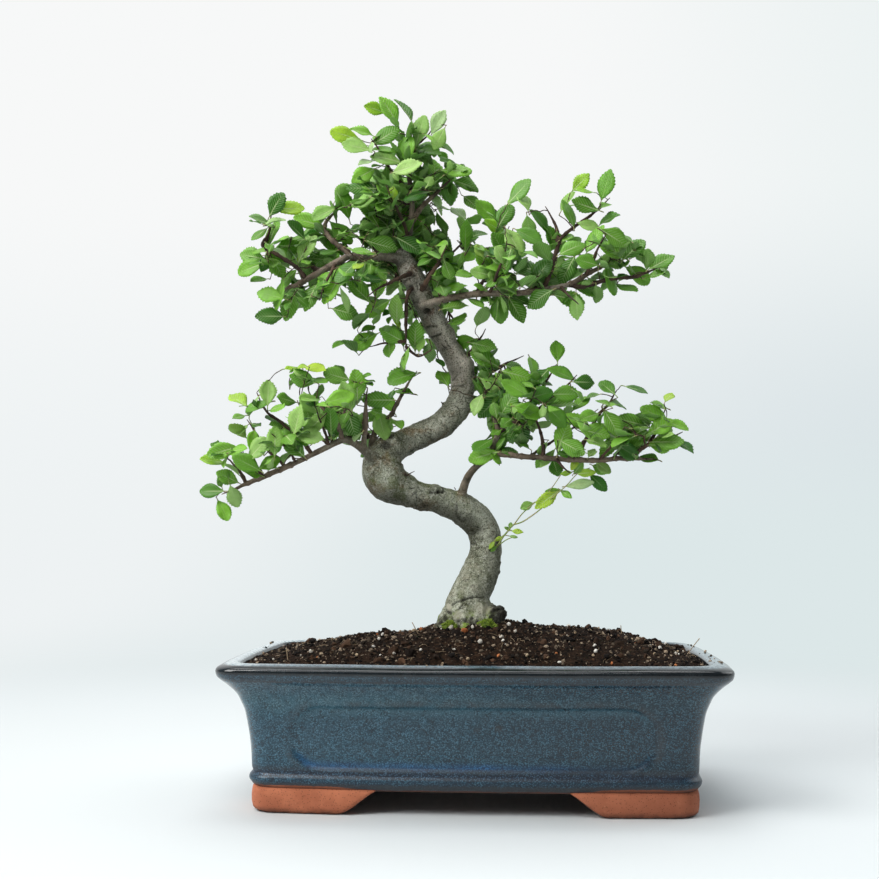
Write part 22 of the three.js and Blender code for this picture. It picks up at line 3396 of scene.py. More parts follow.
# Bark marks: place, radius, height (less than 0 sinks), shade (1 dark, -1 pale).
MARKS = [(-33.2, -8.7, 314.2, 1.6, -0.9, 0.9), (-31.2, -7.6, 310.6, 3.2, -2, 0.97), (-34.7, -10, 320.8, 3.3, 0.4, -0.5), (-38.7, -8.9, 318.4, 2.6, 0.3, -0.4), (-59.6, -6, 334.1, 3.6, 1.2, 0.6), (-62.2, -6, 330.7, 2.4, 0.8, 0.5), (-41.9, -10.6, 325.1, 2.2, -0.9, 0.9), (-43.5, -11.2, 327.7, 1.4, 0.3, -0.6), (-41, -4.7, 316.6, 2, -0.3, 0.75), (-29.8, -5.3, 339.1, 2.6, 0.5, 0.35), (-47.2, -9.9, 342.4, 3, 0.8, 0.4), (-52, -14.7, 341.3, 2.3, 0.5, 0.5), (-57, -5.3, 328.8, 2.6, 0.6, 0.6), (-14.9, 6, 298.8, 3.5, 1.5, 0.35), (-4, 8.3, 278.2, 3.3, 1.6, 0.2), (-5.3, 7.1, 279.4, 1.3, 0.5, -0.8), (-2.1, 11.5, 271.9, 2.7, 0.6, 0.3), (-22.4, 14, 251.1, 1.6, 2, 0.8), (-16.1, 10.8, 229.6, 1.5, 0.9, -0.4), (-43.6, -26, 201.1, 1.7, 1, 0.8), (-37.6, -22.2, 197.5, 1.4, 0.8, 0.4), (-24.8, -14.4, 193.4, 3, 1.9, 0.3), (-28.1, -17.7, 192.2, 2, 1, 0.3), (-21.6, -13.6, 192, 1.7, 1.2, 0.5), (-24, -16.4, 190.4, 1.4, -0.7, 1), (-21.5, -15.2, 190.2, 1.2, -0.6, 1), (-31.9, -18.4, 181.2, 1.1, -0.5, 0.95), (-44, -19.3, 181.2, 1.2, 0.7, 0.6), (-35.6, -12.8, 177.9, 1.7, 1.3, 0.5), (-22.8, -6, 173.6, 1.4, 1.1, 0.7), (-13.8, 1.7, 169.1, 1.1, 0.9, 0.7), (-10.7, -7.3, 191.9, 1, -0.3, 0.8), (-56.8, -20.8, 220, 4.8, -0.9, 0.85), (-54.2, -15.7, 225.6, 3.2, -0.6, 0.75), (-53.3, -5.5, 231.1, 2.6, -0.5, 0.6), (-49.1, -14.5, 224.4, 3.2, -0.2, 0.45), (-53.5, -21.3, 214.2, 3.2, -0.3, 0.55), (-67, -26.6, 205.6, 1.9, 0.4, 0.35), (-59.6, -29.1, 191.5, 3.8, 0.5, -0.35), (-55.7, -29.5, 188.9, 3.2, 0.4, -0.25), (-46.9, -28.9, 195.3, 5.7, 0, 0.12), (9.9, -1.9, 153.5, 1.6, -0.9, 0.98), (14.9, 2.6, 158.1, 1.3, -0.4, 0.9), (7.2, -3, 151.6, 1.5, 0.7, -0.25), (15.5, 4.1, 145, 1.3, 0.8, 0.6), (15.1, 5, 139.1, 1.6, 1.1, 0.7), (10.9, -4.5, 122.8, 1.3, 1.1, 0.8), (14.7, -12, 114.9, 3.6, 4.2, 0.96), (12.4, -8.4, 119.1, 2.3, 1.6, 0.9), (16, -13.9, 110.9, 2.9, 3.6, 0.96), (13.8, -17.7, 108.9, 2.9, 2.4, 0.95), (11.2, -15.1, 114.4, 2.5, 0.8, 0.9), (10.7, -18.8, 110.2, 2.5, 0.6, 0.9), (17.4, -3.3, 115, 1.3, 1.2, 0.9), (-16.9, -13.7, 116.9, 1.9, 0.3, -0.95), (-11.4, -17.8, 113, 2.8, 0.4, -0.6), (5.5, -16, 115.1, 3.6, 0.4, -0.75), (2.3, -14.9, 117.5, 2.5, 0.2, -0.4), (-16.4, -16.8, 113.8, 1.7, -0.3, 0.9), (-18.5, -18.7, 110.7, 1.9, 0, 0.85), (-5.7, -19.7, 110.7, 1.9, -0.4, 0.9), (-1.9, -19.8, 110.6, 1.4, -0.3, 0.8), (-21.8, -16.6, 108.1, 2.5, 0, 0.8), (-10.8, -19.8, 110.2, 1.6, -0.2, 0.7), (-7, -5.4, 137.4, 3.2, 0.3, -0.25), (-1, -10.7, 129.3, 3.2, 0.3, -0.3), (-8.1, -9.7, 128, 2.6, 0.2, -0.25), (1.5, -7, 140.7, 3.2, 0.2, -0.2)]

# Pale grit: place on the soil, size, kind (0 perlite, 1 beige, 2 orange).
PEBBLES = [(-15.1, -26, 1.66, 0), (-1.2, -32, 1.09, 0), (21.4, -23.5, 1.03, 0), (17, -47.5, 1.37, 0), (4.2, -56, 1.37, 0), (18, -54, 0.86, 0), (-59.3, -34, 1.03, 0), (-61, -48, 0.86, 0), (-99.6, -47.5, 1.14, 0), (72.9, -63.5, 1.26, 0), (72.6, -55, 0.91, 0), (114.5, -27, 1.03, 0), (-46.8, -64, 0.97, 0), (-30.9, -64, 0.97, 0), (-10.9, -64.5, 0.91, 0), (122.8, -38, 0.91, 0), (-91.8, -57, 0.97, 1), (-69.2, -64, 0.97, 1), (-49.4, -73, 0.86, 1), (-16.7, -80, 0.8, 1), (-2.3, -73.5, 0.97, 1), (17.1, -47.5, 1.09, 1), (12.4, -51, 0.91, 1), (32.2, -69.5, 0.91, 1), (44.1, -72.5, 0.91, 1), (108.5, -52, 0.91, 1), (-5.9, -36.5, 1.71, 2), (15.5, -71, 0.97, 2), (81, -78.5, 0.91, 2)]

# Long straws: points, radius.
STRAWS = [([(-36, -22, 101.1), (-37.9, -21, 104.5), (-39.8, -20, 107.9)], 0.32), ([(-110.1, -66.5, 88.2), (-110.7, -65.9, 91.1), (-111.4, -65.3, 95.9)], 0.28), ([(93.1, -6.5, 99.9), (92.7, -5.9, 102.4), (92.5, -5.3, 105.6)], 0.26), ([(131.6, -22.5, 89.1), (136, -21.5, 94.6), (139.7, -20.5, 98.9)], 0.28)]

# Crumbs lying on the rim: place, size.
RIM_CRUMBS = [(2.7, 84.1, 87.5, 0.36), (-141.6, 54.2, 87.5, 0.36), (144.2, 48.3, 87.5, 0.71), (142.9, 58.1, 87.5, 0.35), (-77.4, 85.8, 87.5, 0.51), (39.8, -86.2, 87.5, 0.35), (142.9, 55, 87.5, 0.35), (148.8, 16.9, 87.5, 0.9), (-143.6, 64.4, 87.5, 0.45), (146.5, -34, 87.5, 0.59), (-144, 26.8, 87.5, 0.52), (-146.6, 67, 87.5, 0.61), (147.5, -55, 87.5, 0.75), (144.1, -26.9, 87.5, 0.84), (-16.9, -86.5, 87.5, 0.96), (-25.2, -88.3, 87.5, 0.92), (-147.2, 60.1, 87.5, 0.45), (-145.2, 53, 87.5, 1.2), (145.9, -51.4, 87.5, 0.57), (145.5, -49.4, 87.5, 0.35), (146.3, -19.7, 87.5, 0.84), (142, -52.4, 87.5, 0.52), (-142, 28.5, 87.5, 0.49), (146.2, 0, 87.5, 0.99), (141.6, -48.8, 87.5, 0.95), (-144.4, 50.4, 87.5, 0.61), (143.1, -38, 87.5, 0.84), (-146.3, 62.6, 87.5, 1.02), (142.2, -59, 87.5, 0.64), (145.7, -16.3, 87.5, 0.46), (-145.1, 49.8, 87.5, 0.6), (142.3, -1.8, 87.5, 0.66), (80, -84.1, 87.5, 0.61), (146.6, -52.5, 87.5, 0.83), (-62, 84, 87.5, 0.58), (145.6, 58.5, 87.5, 0.9), (-143.4, 50.1, 87.5, 0.47), (147.6, -14.5, 87.5, 0.84), (46.4, 85, 87.5, 0.6), (148.4, 15.4, 87.5, 0.7), (-143.5, 19.7, 87.5, 0.89), (145.6, 44.9, 87.5, 0.69), (38.3, -87, 87.5, 0.55), (143.8, 59.8, 87.5, 0.81), (-140.9, 67.2, 87.5, 0.41), (-142.3, 21.5, 87.5, 0.83)]


# ---- materials -----------------------------------------------------------
def glaze_material():
    """Thick slate-blue glaze: dark where it runs thin over edges, blue where it pools, dense pale speckle; bare clay below the glaze line."""
    m = Nodes("pot_glaze")
    c = m.coords()
    x, y, z = m.xyz(c)
    x = m.math("SUBTRACT", x, float(SHIFT[0]))
    y = m.math("SUBTRACT", y, float(SHIFT[1]))
    # distance from the panel's outline, in metres, less than 0 inside it
    ax = m.math("MAXIMUM", m.math("SUBTRACT", m.math("ABSOLUTE", x), 0.108 - 0.019), 0.0)
    dz = m.math("SUBTRACT", z, 0.0446)
    d = m.math("SUBTRACT", m.math("SQRT", m.math("ADD", m.math("MULTIPLY", ax, ax), m.math("MULTIPLY", dz, dz))), 0.019)
    broad = m.noise(c, 22, 4, 0.6)
    mid = m.noise(c, 95, 4, 0.62)
    fine = m.noise(c, 420, 3, 0.6)
    warp = m.math("MULTIPLY", m.math("SUBTRACT", mid, 0.5), 0.004)
    wz = m.math("ADD", z, warp)
    wd = m.math("ADD", d, m.math("MULTIPLY", m.math("SUBTRACT", mid, 0.5), 0.0036))
    on_wall = m.ramp(m.math("ABSOLUTE", y), 0.060, 0.072)
    base = m.mix(m.ramp(broad, 0.34, 0.66), rgb(20, 46, 62), rgb(34, 64, 80))
    base = m.mix(m.ramp(wz, 0.0735, 0.0665, 0.0, 0.60), base, rgb(44, 86, 100))
    base = m.mix(m.ramp(wz, 0.066, 0.050, 0.0, 0.70), base, rgb(24, 50, 66))
    base = m.mix(m.ramp(wz, 0.033, 0.024, 0.0, 0.55), base, rgb(18, 42, 62))
    # painted shade: the glaze darkens towards the right, the side away from the key lamp
    base = m.mix(m.ramp(x, -0.12, 0.14, 0.0, 0.80), base, rgb(8, 24, 36))
    # pools of thick glaze in the panel
    inside = m.math("MULTIPLY", m.ramp(wd, 0.0006, -0.0020), on_wall)
    top_pool = m.math("MULTIPLY", m.math("MULTIPLY", inside, m.ramp(dz, 0.004, 0.015)), m.ramp(wd, -0.0085, -0.0020))
    low_pool = m.math("MULTIPLY", m.math("MULTIPLY", inside, m.ramp(dz, -0.006, -0.0160)), m.ramp(wd, -0.0066, -0.0018))
    low_pool = m.math("MULTIPLY", low_pool, m.ramp(m.noise(c, 40, 2), 0.30, 0.60, 0.45, 1.0))
    base = m.mix(m.math("MULTIPLY", top_pool, 0.50), base, rgb(58, 94, 108))
    # speckle: pale crystals crowded in a dark ground, each with its own strength
    s1, k1 = m.cells2(m.coords((1.0, 1.0, 1.2)), 1050)
    s2, k2 = m.cells2(c, 1500)
    s3, k3 = m.cells2(c, 640)
    crowd = m.ramp(m.noise(c, 190, 3, 0.6), 0.36, 0.62, 0.55, 1.0)
    dots = m.math("MULTIPLY", m.math("MULTIPLY", m.ramp(s1, 0.62, 0.24), m.ramp(k1, 0.05, 0.60, 0.15, 1.0)), crowd)
    # the pale crystals are dimmed towards the right, part of the painted shade on that side
    dots = m.math("MULTIPLY", dots, m.ramp(x, -0.08, 0.15, 1.0, 0.62))
    tiny = m.math("MULTIPLY", m.ramp(s2, 0.46, 0.14), m.ramp(k2, 0.35, 0.95))
    iron = m.math("MULTIPLY", m.ramp(s1, 0.46, 0.72), m.ramp(m.noise(c, 260, 2), 0.42, 0.60))
    spot = m.math("MULTIPLY", m.ramp(s3, 0.34, 0.12), m.ramp(k3, 0.72, 0.90))
    base = m.mix(m.math("MULTIPLY", iron, 0.62), base, rgb(12, 22, 32))
    base = m.mix(m.math("MULTIPLY", dots, 0.66), base, rgb(88, 138, 162))
    base = m.mix(m.math("MULTIPLY", tiny, 0.38), base, rgb(96, 144, 168))
    base = m.mix(m.math("MULTIPLY", spot, 0.60), base, rgb(30, 34, 38))
    base = m.mix(m.ramp(fine, 0.60, 0.80, 0.0, 0.20), base, rgb(78, 76, 74))
    # the pooled blue is painted duller towards the right: painted shade on the panel's right end
    blue = m.mix(m.ramp(x, 0.010, 0.080), rgb(46, 104, 160), rgb(34, 58, 84))
    base = m.mix(m.math("MULTIPLY", low_pool, m.math("ADD", 0.34, m.math("MULTIPLY", dots, 0.55))), base, blue)
    base = m.mix(m.math("MULTIPLY", m.math("MULTIPLY", low_pool, iron), 0.60), base, rgb(20, 34, 58))
    upper = m.math("MULTIPLY", m.ramp(wz, 0.056, 0.067), m.ramp(wz, 0.0795, 0.0770))
    upper = m.math("MULTIPLY", upper, m.ramp(mid, 0.34, 0.62, 0.35, 1.0))
    # this pale band on the upper wall is painted stronger towards the lit left side
    base = m.mix(m.math("MULTIPLY", upper, m.math("ADD", m.ramp(x, 0.06, -0.04, 0.02, 0.12), m.math("MULTIPLY", dots, 0.30))), base, rgb(108, 138, 144))
    band = m.math("MULTIPLY", m.ramp(wz, 0.0246, 0.0228), m.ramp(wz, 0.0150, 0.0172))
    base = m.mix(m.math("MULTIPLY", band, m.ramp(mid, 0.3, 0.65, 0.50, 0.20)), base, rgb(20, 36, 54))
    # thin glaze: the lip, the panel's edge, the moulding, and the line above the clay
    edge = m.math("MULTIPLY", m.ramp(m.math("ABSOLUTE", m.math("SUBTRACT", wd, 0.0014)), 0.0044, 0.0003), m.ramp(m.noise(c, 48, 3), 0.36, 0.62, 0.10, 1.0))
    edge = m.math("MULTIPLY", edge, on_wall)
    lip = m.math("MULTIPLY", m.ramp(wz, 0.0780, 0.0796), m.ramp(wz, 0.0848, 0.0832))
    nose = m.math("MULTIPLY", m.ramp(z, 0.0815, 0.0832), m.ramp(z, 0.0878, 0.0868))
    brk = m.ramp(m.math("ABSOLUTE", m.math("SUBTRACT", wz, 0.0788)), 0.0013, 0.0001)
    foot = m.math("MULTIPLY", m.ramp(wz, 0.0290, 0.0262), m.ramp(wz, 0.0225, 0.0248))
    low = m.ramp(wz, 0.0192, 0.0174)
    groove = m.ramp(m.math("ABSOLUTE", m.math("SUBTRACT", wz, 0.0236)), 0.0024, 0.0008)
    thin = m.math("MAXIMUM", m.math("MULTIPLY", edge, 0.52), m.math("MULTIPLY", lip, 0.50))
    thin = m.math("MAXIMUM", thin, m.math("MULTIPLY", brk, 0.80))
    thin = m.math("MAXIMUM", thin, m.math("MULTIPLY", foot, 0.5))
    thin = m.math("MAXIMUM", thin, m.math("MULTIPLY", low, 0.8))
    thin = m.math("MULTIPLY", thin, m.ramp(mid, 0.25, 0.6, 0.55, 1.0))
    base = m.mix(thin, base, m.mix(fine, rgb(34, 38, 44), rgb(66, 68, 70)))
    base = m.mix(m.math("MULTIPLY", groove, 0.72), base, m.mix(m.math("MULTIPLY", dots, 0.85), rgb(18, 26, 42), rgb(84, 120, 150)))
    # the rim's nose is painted near black: glaze breaking thin over the edge, and a painted dark reflection of the
    # front of the room
    base = m.mix(m.math("MULTIPLY", nose, 0.94), base, m.mix(m.ramp(mid, 0.4, 0.7), rgb(15, 19, 22), rgb(30, 34, 36)))
    # soft round blotches where the glaze crawled, in the upper part of the panel
    sb, kb = m.cells2(c, 62)
    blot = m.math("MULTIPLY", m.math("MULTIPLY", m.ramp(sb, 0.22, 0.09), m.ramp(kb, 0.30, 0.50)), m.math("MULTIPLY", m.ramp(dz, 0.002, 0.008), m.ramp(wd, 0.003, -0.001)))
    base = m.mix(m.math("MULTIPLY", m.math("MULTIPLY", blot, on_wall), 0.62), base, rgb(46, 48, 50))
    # clay
    grit = m.noise(c, 900, 3, 0.7)
    clay = m.mix(m.ramp(m.noise(c, 60, 4, 0.6), 0.3, 0.7), rgb(170, 98, 68), rgb(196, 118, 84))
    # painted shade: the clay darkens towards the right, away from the key lamp
    clay = m.mix(m.ramp(x, -0.02, 0.14, 0.0, 0.45), clay, rgb(128, 74, 54))
    clay = m.mix(m.ramp(m.cells(c, 760), 0.30, 0.12, 0.0, 0.70), clay, rgb(84, 50, 38))
    clay = m.mix(m.ramp(grit, 0.62, 0.78, 0.0, 0.40), clay, rgb(214, 156, 122))
    clay = m.mix(m.math("MULTIPLY", m.ramp(z, 0.0046, 0.0006), m.ramp(m.noise(c, 150, 3), 0.36, 0.62, 0.25, 0.75)), clay, rgb(74, 48, 38))
    line = m.ramp(m.math("ABSOLUTE", x), 0.062, 0.082, 0.0149, 0.0166)
    bare = m.ramp(m.math("SUBTRACT", m.math("ADD", z, m.math("MULTIPLY", m.math("SUBTRACT", mid, 0.5), 0.0024)), line), 0.0004, -0.0003)
    # the rim's level top: a painted pale reflection of the bright backdrop, strongest on the left
    level = m.math("MULTIPLY", m.ramp(z, 0.0868, 0.0876), m.math("MAXIMUM", m.math("MAXIMUM", m.ramp(m.math("ABSOLUTE", x), 0.105, 0.140), m.ramp(y, 0.060, 0.082)), 0.45))
    rim_reflection = m.mix(m.ramp(fine, 0.38, 0.60), rgb(78, 100, 110), rgb(150, 170, 178))
    rim_reflection = m.mix(m.ramp(x, -0.085, -0.130), rim_reflection, m.mix(m.ramp(fine, 0.36, 0.56), rgb(132, 154, 164), rgb(214, 226, 230)))
    base = m.mix(m.math("MULTIPLY", level, m.math("ADD", m.ramp(mid, 0.3, 0.6, 0.40, 0.66), m.ramp(x, -0.085, -0.130, 0.0, 0.24))), base, rim_reflection)
    # the clay's downward faces are darkened: painted shade under the pot, with some dirt
    nz = m.xyz(m.node("NewGeometry").outputs["Normal"])[2]
    clay = m.mix(m.math("MULTIPLY", m.ramp(nz, -0.40, -0.85), m.ramp(z, 0.0030, 0.0080, 0.2, 0.85)), clay, rgb(44, 37, 35))
    color = m.mix(bare, base, clay)
    h = m.math("ADD", m.math("MULTIPLY", m.noise(c, 160, 3, 0.5), 0.5), m.math("MULTIPLY", fine, 0.08))
    hc = m.math("MULTIPLY", grit, 1.4)
    n1 = m.bump(m.mix(bare, h, hc), m.ramp(z, 0.080, 0.084, 0.26, 0.10), 0.0005)
    rough = m.math("ADD", m.ramp(bare, 0.0, 1.0, 0.15, 0.82), m.math("MULTIPLY", thin, 0.12))
    rough = m.math("ADD", rough, m.math("MULTIPLY", m.ramp(z, 0.040, 0.028, 0.0, 0.26), m.ramp(bare, 0.0, 1.0, 1.0, 0.0)))
    n = m.node("BsdfPrincipled")
    m.put(n.inputs["Base Color"], color)
    m.put(n.inputs["Roughness"], rough)
    m.put(n.inputs["Normal"], n1)
    m.put(n.inputs["IOR"], 1.50)
    return m.done(n.outputs[0])


def bark_material(name, kind="trunk"):
    """Elm bark: granular and grey-green on the trunk, pinkish-brown on the limbs, near black-brown on twigs."""
    m = Nodes(name)
    c = m.coords()
    x, y, z = m.xyz(c)
    stretched = m.coords((1.0, 1.0, 0.45))
    patch = m.noise(stretched, 70, 4, 0.62, 0.3)
    blotch = m.noise(c, 230, 4, 0.7)
    fine = m.noise(c, 940, 4, 0.70)
    grain = m.noise(c, 1900, 2, 0.6)
    if kind != "trunk":
        lo, hi, dk, pl = ((54, 40, 33), (88, 68, 55), (30, 22, 18), (124, 102, 84)) if kind == "twig" else ((84, 72, 60), (130, 114, 98), (38, 31, 26), (172, 156, 138))
        base = m.mix(m.ramp(patch, 0.35, 0.65), rgb(*lo), rgb(*hi))
        base = m.mix(m.ramp(blotch, 0.52, 0.68, 0.0, 0.8), base, rgb(*dk))
        base = m.mix(m.ramp(fine, 0.56, 0.76, 0.0, 0.5), base, rgb(*pl))
        h = m.math("ADD", m.math("MULTIPLY", blotch, 0.8), m.math("MULTIPLY", fine, 0.5))
        return m.done(m.principled(base, m.ramp(fine, 0.3, 0.7, 0.72, 0.9), m.bump(h, 0.55, 0.0004), Specular_IOR_Level=0.3))
    up = m.ramp(z, 0.185, 0.300)
    low = m.mix(m.ramp(patch, 0.38, 0.62), rgb(138, 141, 118), rgb(196, 198, 178))
    high = m.mix(m.ramp(patch, 0.38, 0.62), rgb(152, 147, 133), rgb(204, 198, 184))
    base = m.mix(up, low, high)
    warm = m.math("MULTIPLY", m.ramp(m.noise(c, 64, 4, 0.66), 0.50, 0.64), m.ramp(z, 0.140, 0.190, 0.30, 1.0))
    base = m.mix(m.math("MULTIPLY", warm, 0.72), base, m.mix(m.ramp(z, 0.285, 0.315), rgb(138, 112, 78), rgb(124, 90, 72)))
    reach = m.math("MULTIPLY", m.ramp(z, 0.252, 0.270), m.ramp(z, 0.312, 0.292))
    base = m.mix(m.math("MULTIPLY", reach, m.ramp(patch, 0.34, 0.56, 0.42, 0.95)), base, rgb(234, 220, 206))
    # broad darker weathering and the mottle over it
    base = m.mix(m.ramp(m.noise(c, 42, 3, 0.6), 0.52, 0.68, 0.0, 0.50), base, m.mix(up, rgb(84, 88, 58), rgb(72, 70, 50)))
    base = m.mix(m.ramp(blotch, 0.53, 0.70, 0.0, 0.62), base, m.mix(up, rgb(62, 64, 48), rgb(56, 52, 43)))
    base = m.mix(m.ramp(blotch, 0.46, 0.34, 0.0, 0.75), base, m.mix(up, rgb(214, 216, 200), rgb(208, 202, 188)))
    # granular speckle
    base = m.mix(m.ramp(fine, 0.525, 0.62, 0.0, 0.78), base, rgb(36, 35, 27))
    base = m.mix(m.ramp(fine, 0.45, 0.36, 0.0, 0.62), base, m.mix(up, rgb(228, 228, 212), rgb(232, 226, 214)))
    base = m.mix(m.ramp(grain, 0.58, 0.68, 0.0, 0.50), base, rgb(40, 38, 30))
    base = m.mix(m.ramp(grain, 0.42, 0.33, 0.0, 0.35), base, rgb(210, 208, 192))
    lichen = m.math("MULTIPLY", m.ramp(m.noise(c, 150, 4, 0.7), 0.56, 0.64), m.ramp(z, 0.150, 0.110))
    base = m.mix(m.math("MULTIPLY", lichen, 0.62), base, rgb(198, 204, 182))
    algae = m.math("MULTIPLY", m.ramp(m.noise(c, 85, 3, 0.6), 0.52, 0.66), m.math("MAXIMUM", m.ramp(z, 0.150, 0.108), m.math("MULTIPLY", m.ramp(z, 0.170, 0.190), m.ramp(z, 0.232, 0.205))))
    base = m.mix(m.math("MULTIPLY", algae, 0.48), base, rgb(92, 104, 44))
    # fine cracks across and along the stem
    ce = m.cells(m.coords((1.0, 1.0, 1.7)), 120, feature="DISTANCE_TO_EDGE")
    crack = m.math("MULTIPLY", m.ramp(ce, 0.050, 0.008), m.ramp(m.noise(c, 55, 3, 0.6), 0.49, 0.62))
    base = m.mix(m.math("MULTIPLY", crack, 0.66), base, rgb(36, 32, 24))
    # painted shade under the crown: the top of the trunk is darkened
    base = m.mix(m.math("MULTIPLY", m.ramp(z, 0.322, 0.345), 0.18), base, rgb(60, 56, 50))
    # young limbs are smoother and pinkish brown
    limb = m.mix(m.ramp(patch, 0.35, 0.65), rgb(84, 72, 60), rgb(130, 114, 98))
    limb = m.mix(m.ramp(blotch, 0.52, 0.68, 0.0, 0.8), limb, rgb(44, 34, 29))
    limb = m.mix(m.ramp(fine, 0.54, 0.70, 0.0, 0.6), limb, rgb(180, 162, 142))
    base = m.mix(m.math("MULTIPLY", m.attr("slim"), m.ramp(m.noise(c, 60, 3), 0.3, 0.7, 0.7, 1.0)), base, limb)
    stain = m.math("MULTIPLY", m.ramp(m.noise(c, 180, 4, 0.7), 0.40, 0.54), m.ramp(z, 0.1125, 0.1065))
    base = m.mix(m.math("MULTIPLY", stain, 0.80), base, rgb(44, 36, 27))
    # a green film of moss creeps up the foot of the trunk
    film = m.math("MULTIPLY", m.ramp(m.noise(c, 130, 4, 0.7), 0.53, 0.60), m.ramp(z, 0.119, 0.107))
    base = m.mix(m.math("MULTIPLY", film, 0.85), base, m.mix(m.ramp(fine, 0.4, 0.6), rgb(96, 122, 38), rgb(150, 176, 66)))
    base = m.mix(m.math("MULTIPLY", m.attr("scar"), m.ramp(blotch, 0.30, 0.60, 0.80, 1.0)), base, rgb(24, 21, 17))
    base = m.mix(m.math("MULTIPLY", m.attr("pale"), 0.70), base, rgb(208, 202, 182))
    # painted shade: the undersides and right-facing sides of the wood are darkened
    base = m.mix(m.math("MULTIPLY", m.attr("under"), 0.74), base, rgb(48, 46, 34))
    h = m.math("ADD", m.math("MULTIPLY", blotch, 0.8), m.math("MULTIPLY", fine, 0.9))
    h = m.math("SUBTRACT", h, m.math("MULTIPLY", crack, 0.9))
    n1 = m.bump(h, 0.85, 0.0010)
    return m.done(m.principled(base, m.ramp(fine, 0.3, 0.7, 0.74, 0.92), n1, Specular_IOR_Level=0.28))


def leaf_material():
    """Elm leaf: pinnate veins off a pale midrib, satin above, paler below, light passing through."""
    m = Nodes("leaf")
    uvn = m.node("UVMap", uv_map="leaf_uv").outputs[0]
    u, v, _ = m.xyz(uvn)
    c = m.coords()
    tone, age, side, rib_show = m.attr("tone"), m.attr("age"), m.attr("side"), m.attr("rib")
    deep = m.attr("deep")
    av = m.math("ABSOLUTE", m.math("SUBTRACT", v, 0.5))
    q = m.math("SUBTRACT", u, m.math("MULTIPLY", av, 0.95))
    fr = m.math("FRACT", m.math("MULTIPLY", q, 10.0))
    vd = m.math("MINIMUM", fr, m.math("SUBTRACT", 1.0, fr))
    vein = m.math("MULTIPLY", m.ramp(vd, 0.16, 0.03), m.ramp(av, 0.34, 0.05, 0.15, 1.0))
    rib = m.math("MULTIPLY", m.ramp(av, 0.026, 0.008), m.ramp(u, 0.95, 0.35, 0.0, 1.0))
    blot = m.noise(c, 190, 3, 0.6)
    small = m.noise(c, 620, 3, 0.6)
    fine = m.noise(c, 1500, 2, 0.6)
    mature = m.mix(tone, rgb(54, 116, 20), rgb(150, 214, 68))
    light = m.mix(tone, rgb(132, 188, 66), rgb(186, 228, 126))
    pale = m.mix(tone, rgb(160, 204, 116), rgb(200, 230, 164))
    young = m.mix(tone, rgb(154, 212, 30), rgb(206, 238, 70))
    col = m.mix(m.ramp(age, 2.2, 2.8, kind="LINEAR"), mature, light)
    is2 = m.math("MULTIPLY", m.ramp(age, 1.2, 1.8, kind="LINEAR"), m.ramp(age, 2.8, 2.2, kind="LINEAR"))
    is1 = m.math("MULTIPLY", m.ramp(age, 0.2, 0.8, kind="LINEAR"), m.ramp(age, 1.8, 1.2, kind="LINEAR"))
    col = m.mix(is2, col, pale)
    col = m.mix(is1, col, young)
    # painted shade: leaves far inside the crown are darker and bluer
    col = m.mix(m.math("MULTIPLY", deep, 0.92), col, m.mix(0.80, col, rgb(24, 62, 30)))
    # cooler and warmer leaves, and cloudy shade within each
    col = m.mix(m.math("MULTIPLY", m.attr("hue"), 0.30), col, m.mix(0.5, col, rgb(44, 128, 74)))
    col = m.mix(m.ramp(blot, 0.38, 0.64, 0.0, 0.38), col, m.mix(0.55, col, rgb(46, 82, 22)))
    col = m.mix(m.ramp(small, 0.54, 0.70, 0.0, 0.30), col, m.mix(0.6, col, rgb(40, 74, 22)))
    # painted shade in the hollows: the blade is darkened towards each vein, where it swells between them
    col = m.mix(m.math("MULTIPLY", m.ramp(vd, 0.30, 0.14), 0.10), col, m.mix(0.6, col, rgb(38, 78, 22)))
    col = m.mix(m.math("MULTIPLY", vein, m.math("MULTIPLY", rib_show, 0.72)), col, rgb(200, 230, 152))
    col = m.mix(m.ramp(av, 0.24, 0.31, 0.0, 0.20), col, rgb(150, 186, 92))
    top = m.mix(m.math("MULTIPLY", m.math("MULTIPLY", rib, m.ramp(rib_show, 0.0, 0.6, 0.25, 1.0)), 0.80), col, rgb(206, 226, 160))
    under = m.mix(0.52, col, rgb(142, 176, 108))
    under = m.mix(m.math("MULTIPLY", m.math("MAXIMUM", vein, rib), 0.35), under, rgb(190, 208, 156))
    color = m.mix(side, under, top)
    h = m.math("SUBTRACT", m.math("MULTIPLY", small, 0.55), m.math("MULTIPLY", m.math("ADD", vein, rib), 0.45))
    h = m.math("ADD", h, m.math("MULTIPLY", fine, 0.15))
    n1 = m.bump(h, 0.60, 0.00040)
    rough = m.ramp(side, 0.0, 1.0, 0.64, 0.41)
    p = m.principled(color, rough, n1, Specular_IOR_Level=0.42)
    t = m.node("BsdfTranslucent")
    m.put(t.inputs["Color"], m.mix(0.5, color, rgb(160, 220, 30)))
    m.put(t.inputs["Normal"], n1)
    mx = m.node("MixShader")
    mx.inputs[0].default_value = 0.27
    m.tree.links.new(p, mx.inputs[1])
    m.tree.links.new(t.outputs[0], mx.inputs[2])
    return m.done(mx.outputs[0])


def stem_material():
    m = Nodes("green_stem")
    c = m.coords()
    n = m.noise(c, 260, 3, 0.6)
    col = m.mix(m.ramp(n, 0.35, 0.65), rgb(132, 156, 78), rgb(164, 146, 104))
    return m.done(m.principled(col, 0.55, m.bump(m.noise(c, 1500, 2), 0.3, 0.0002)))


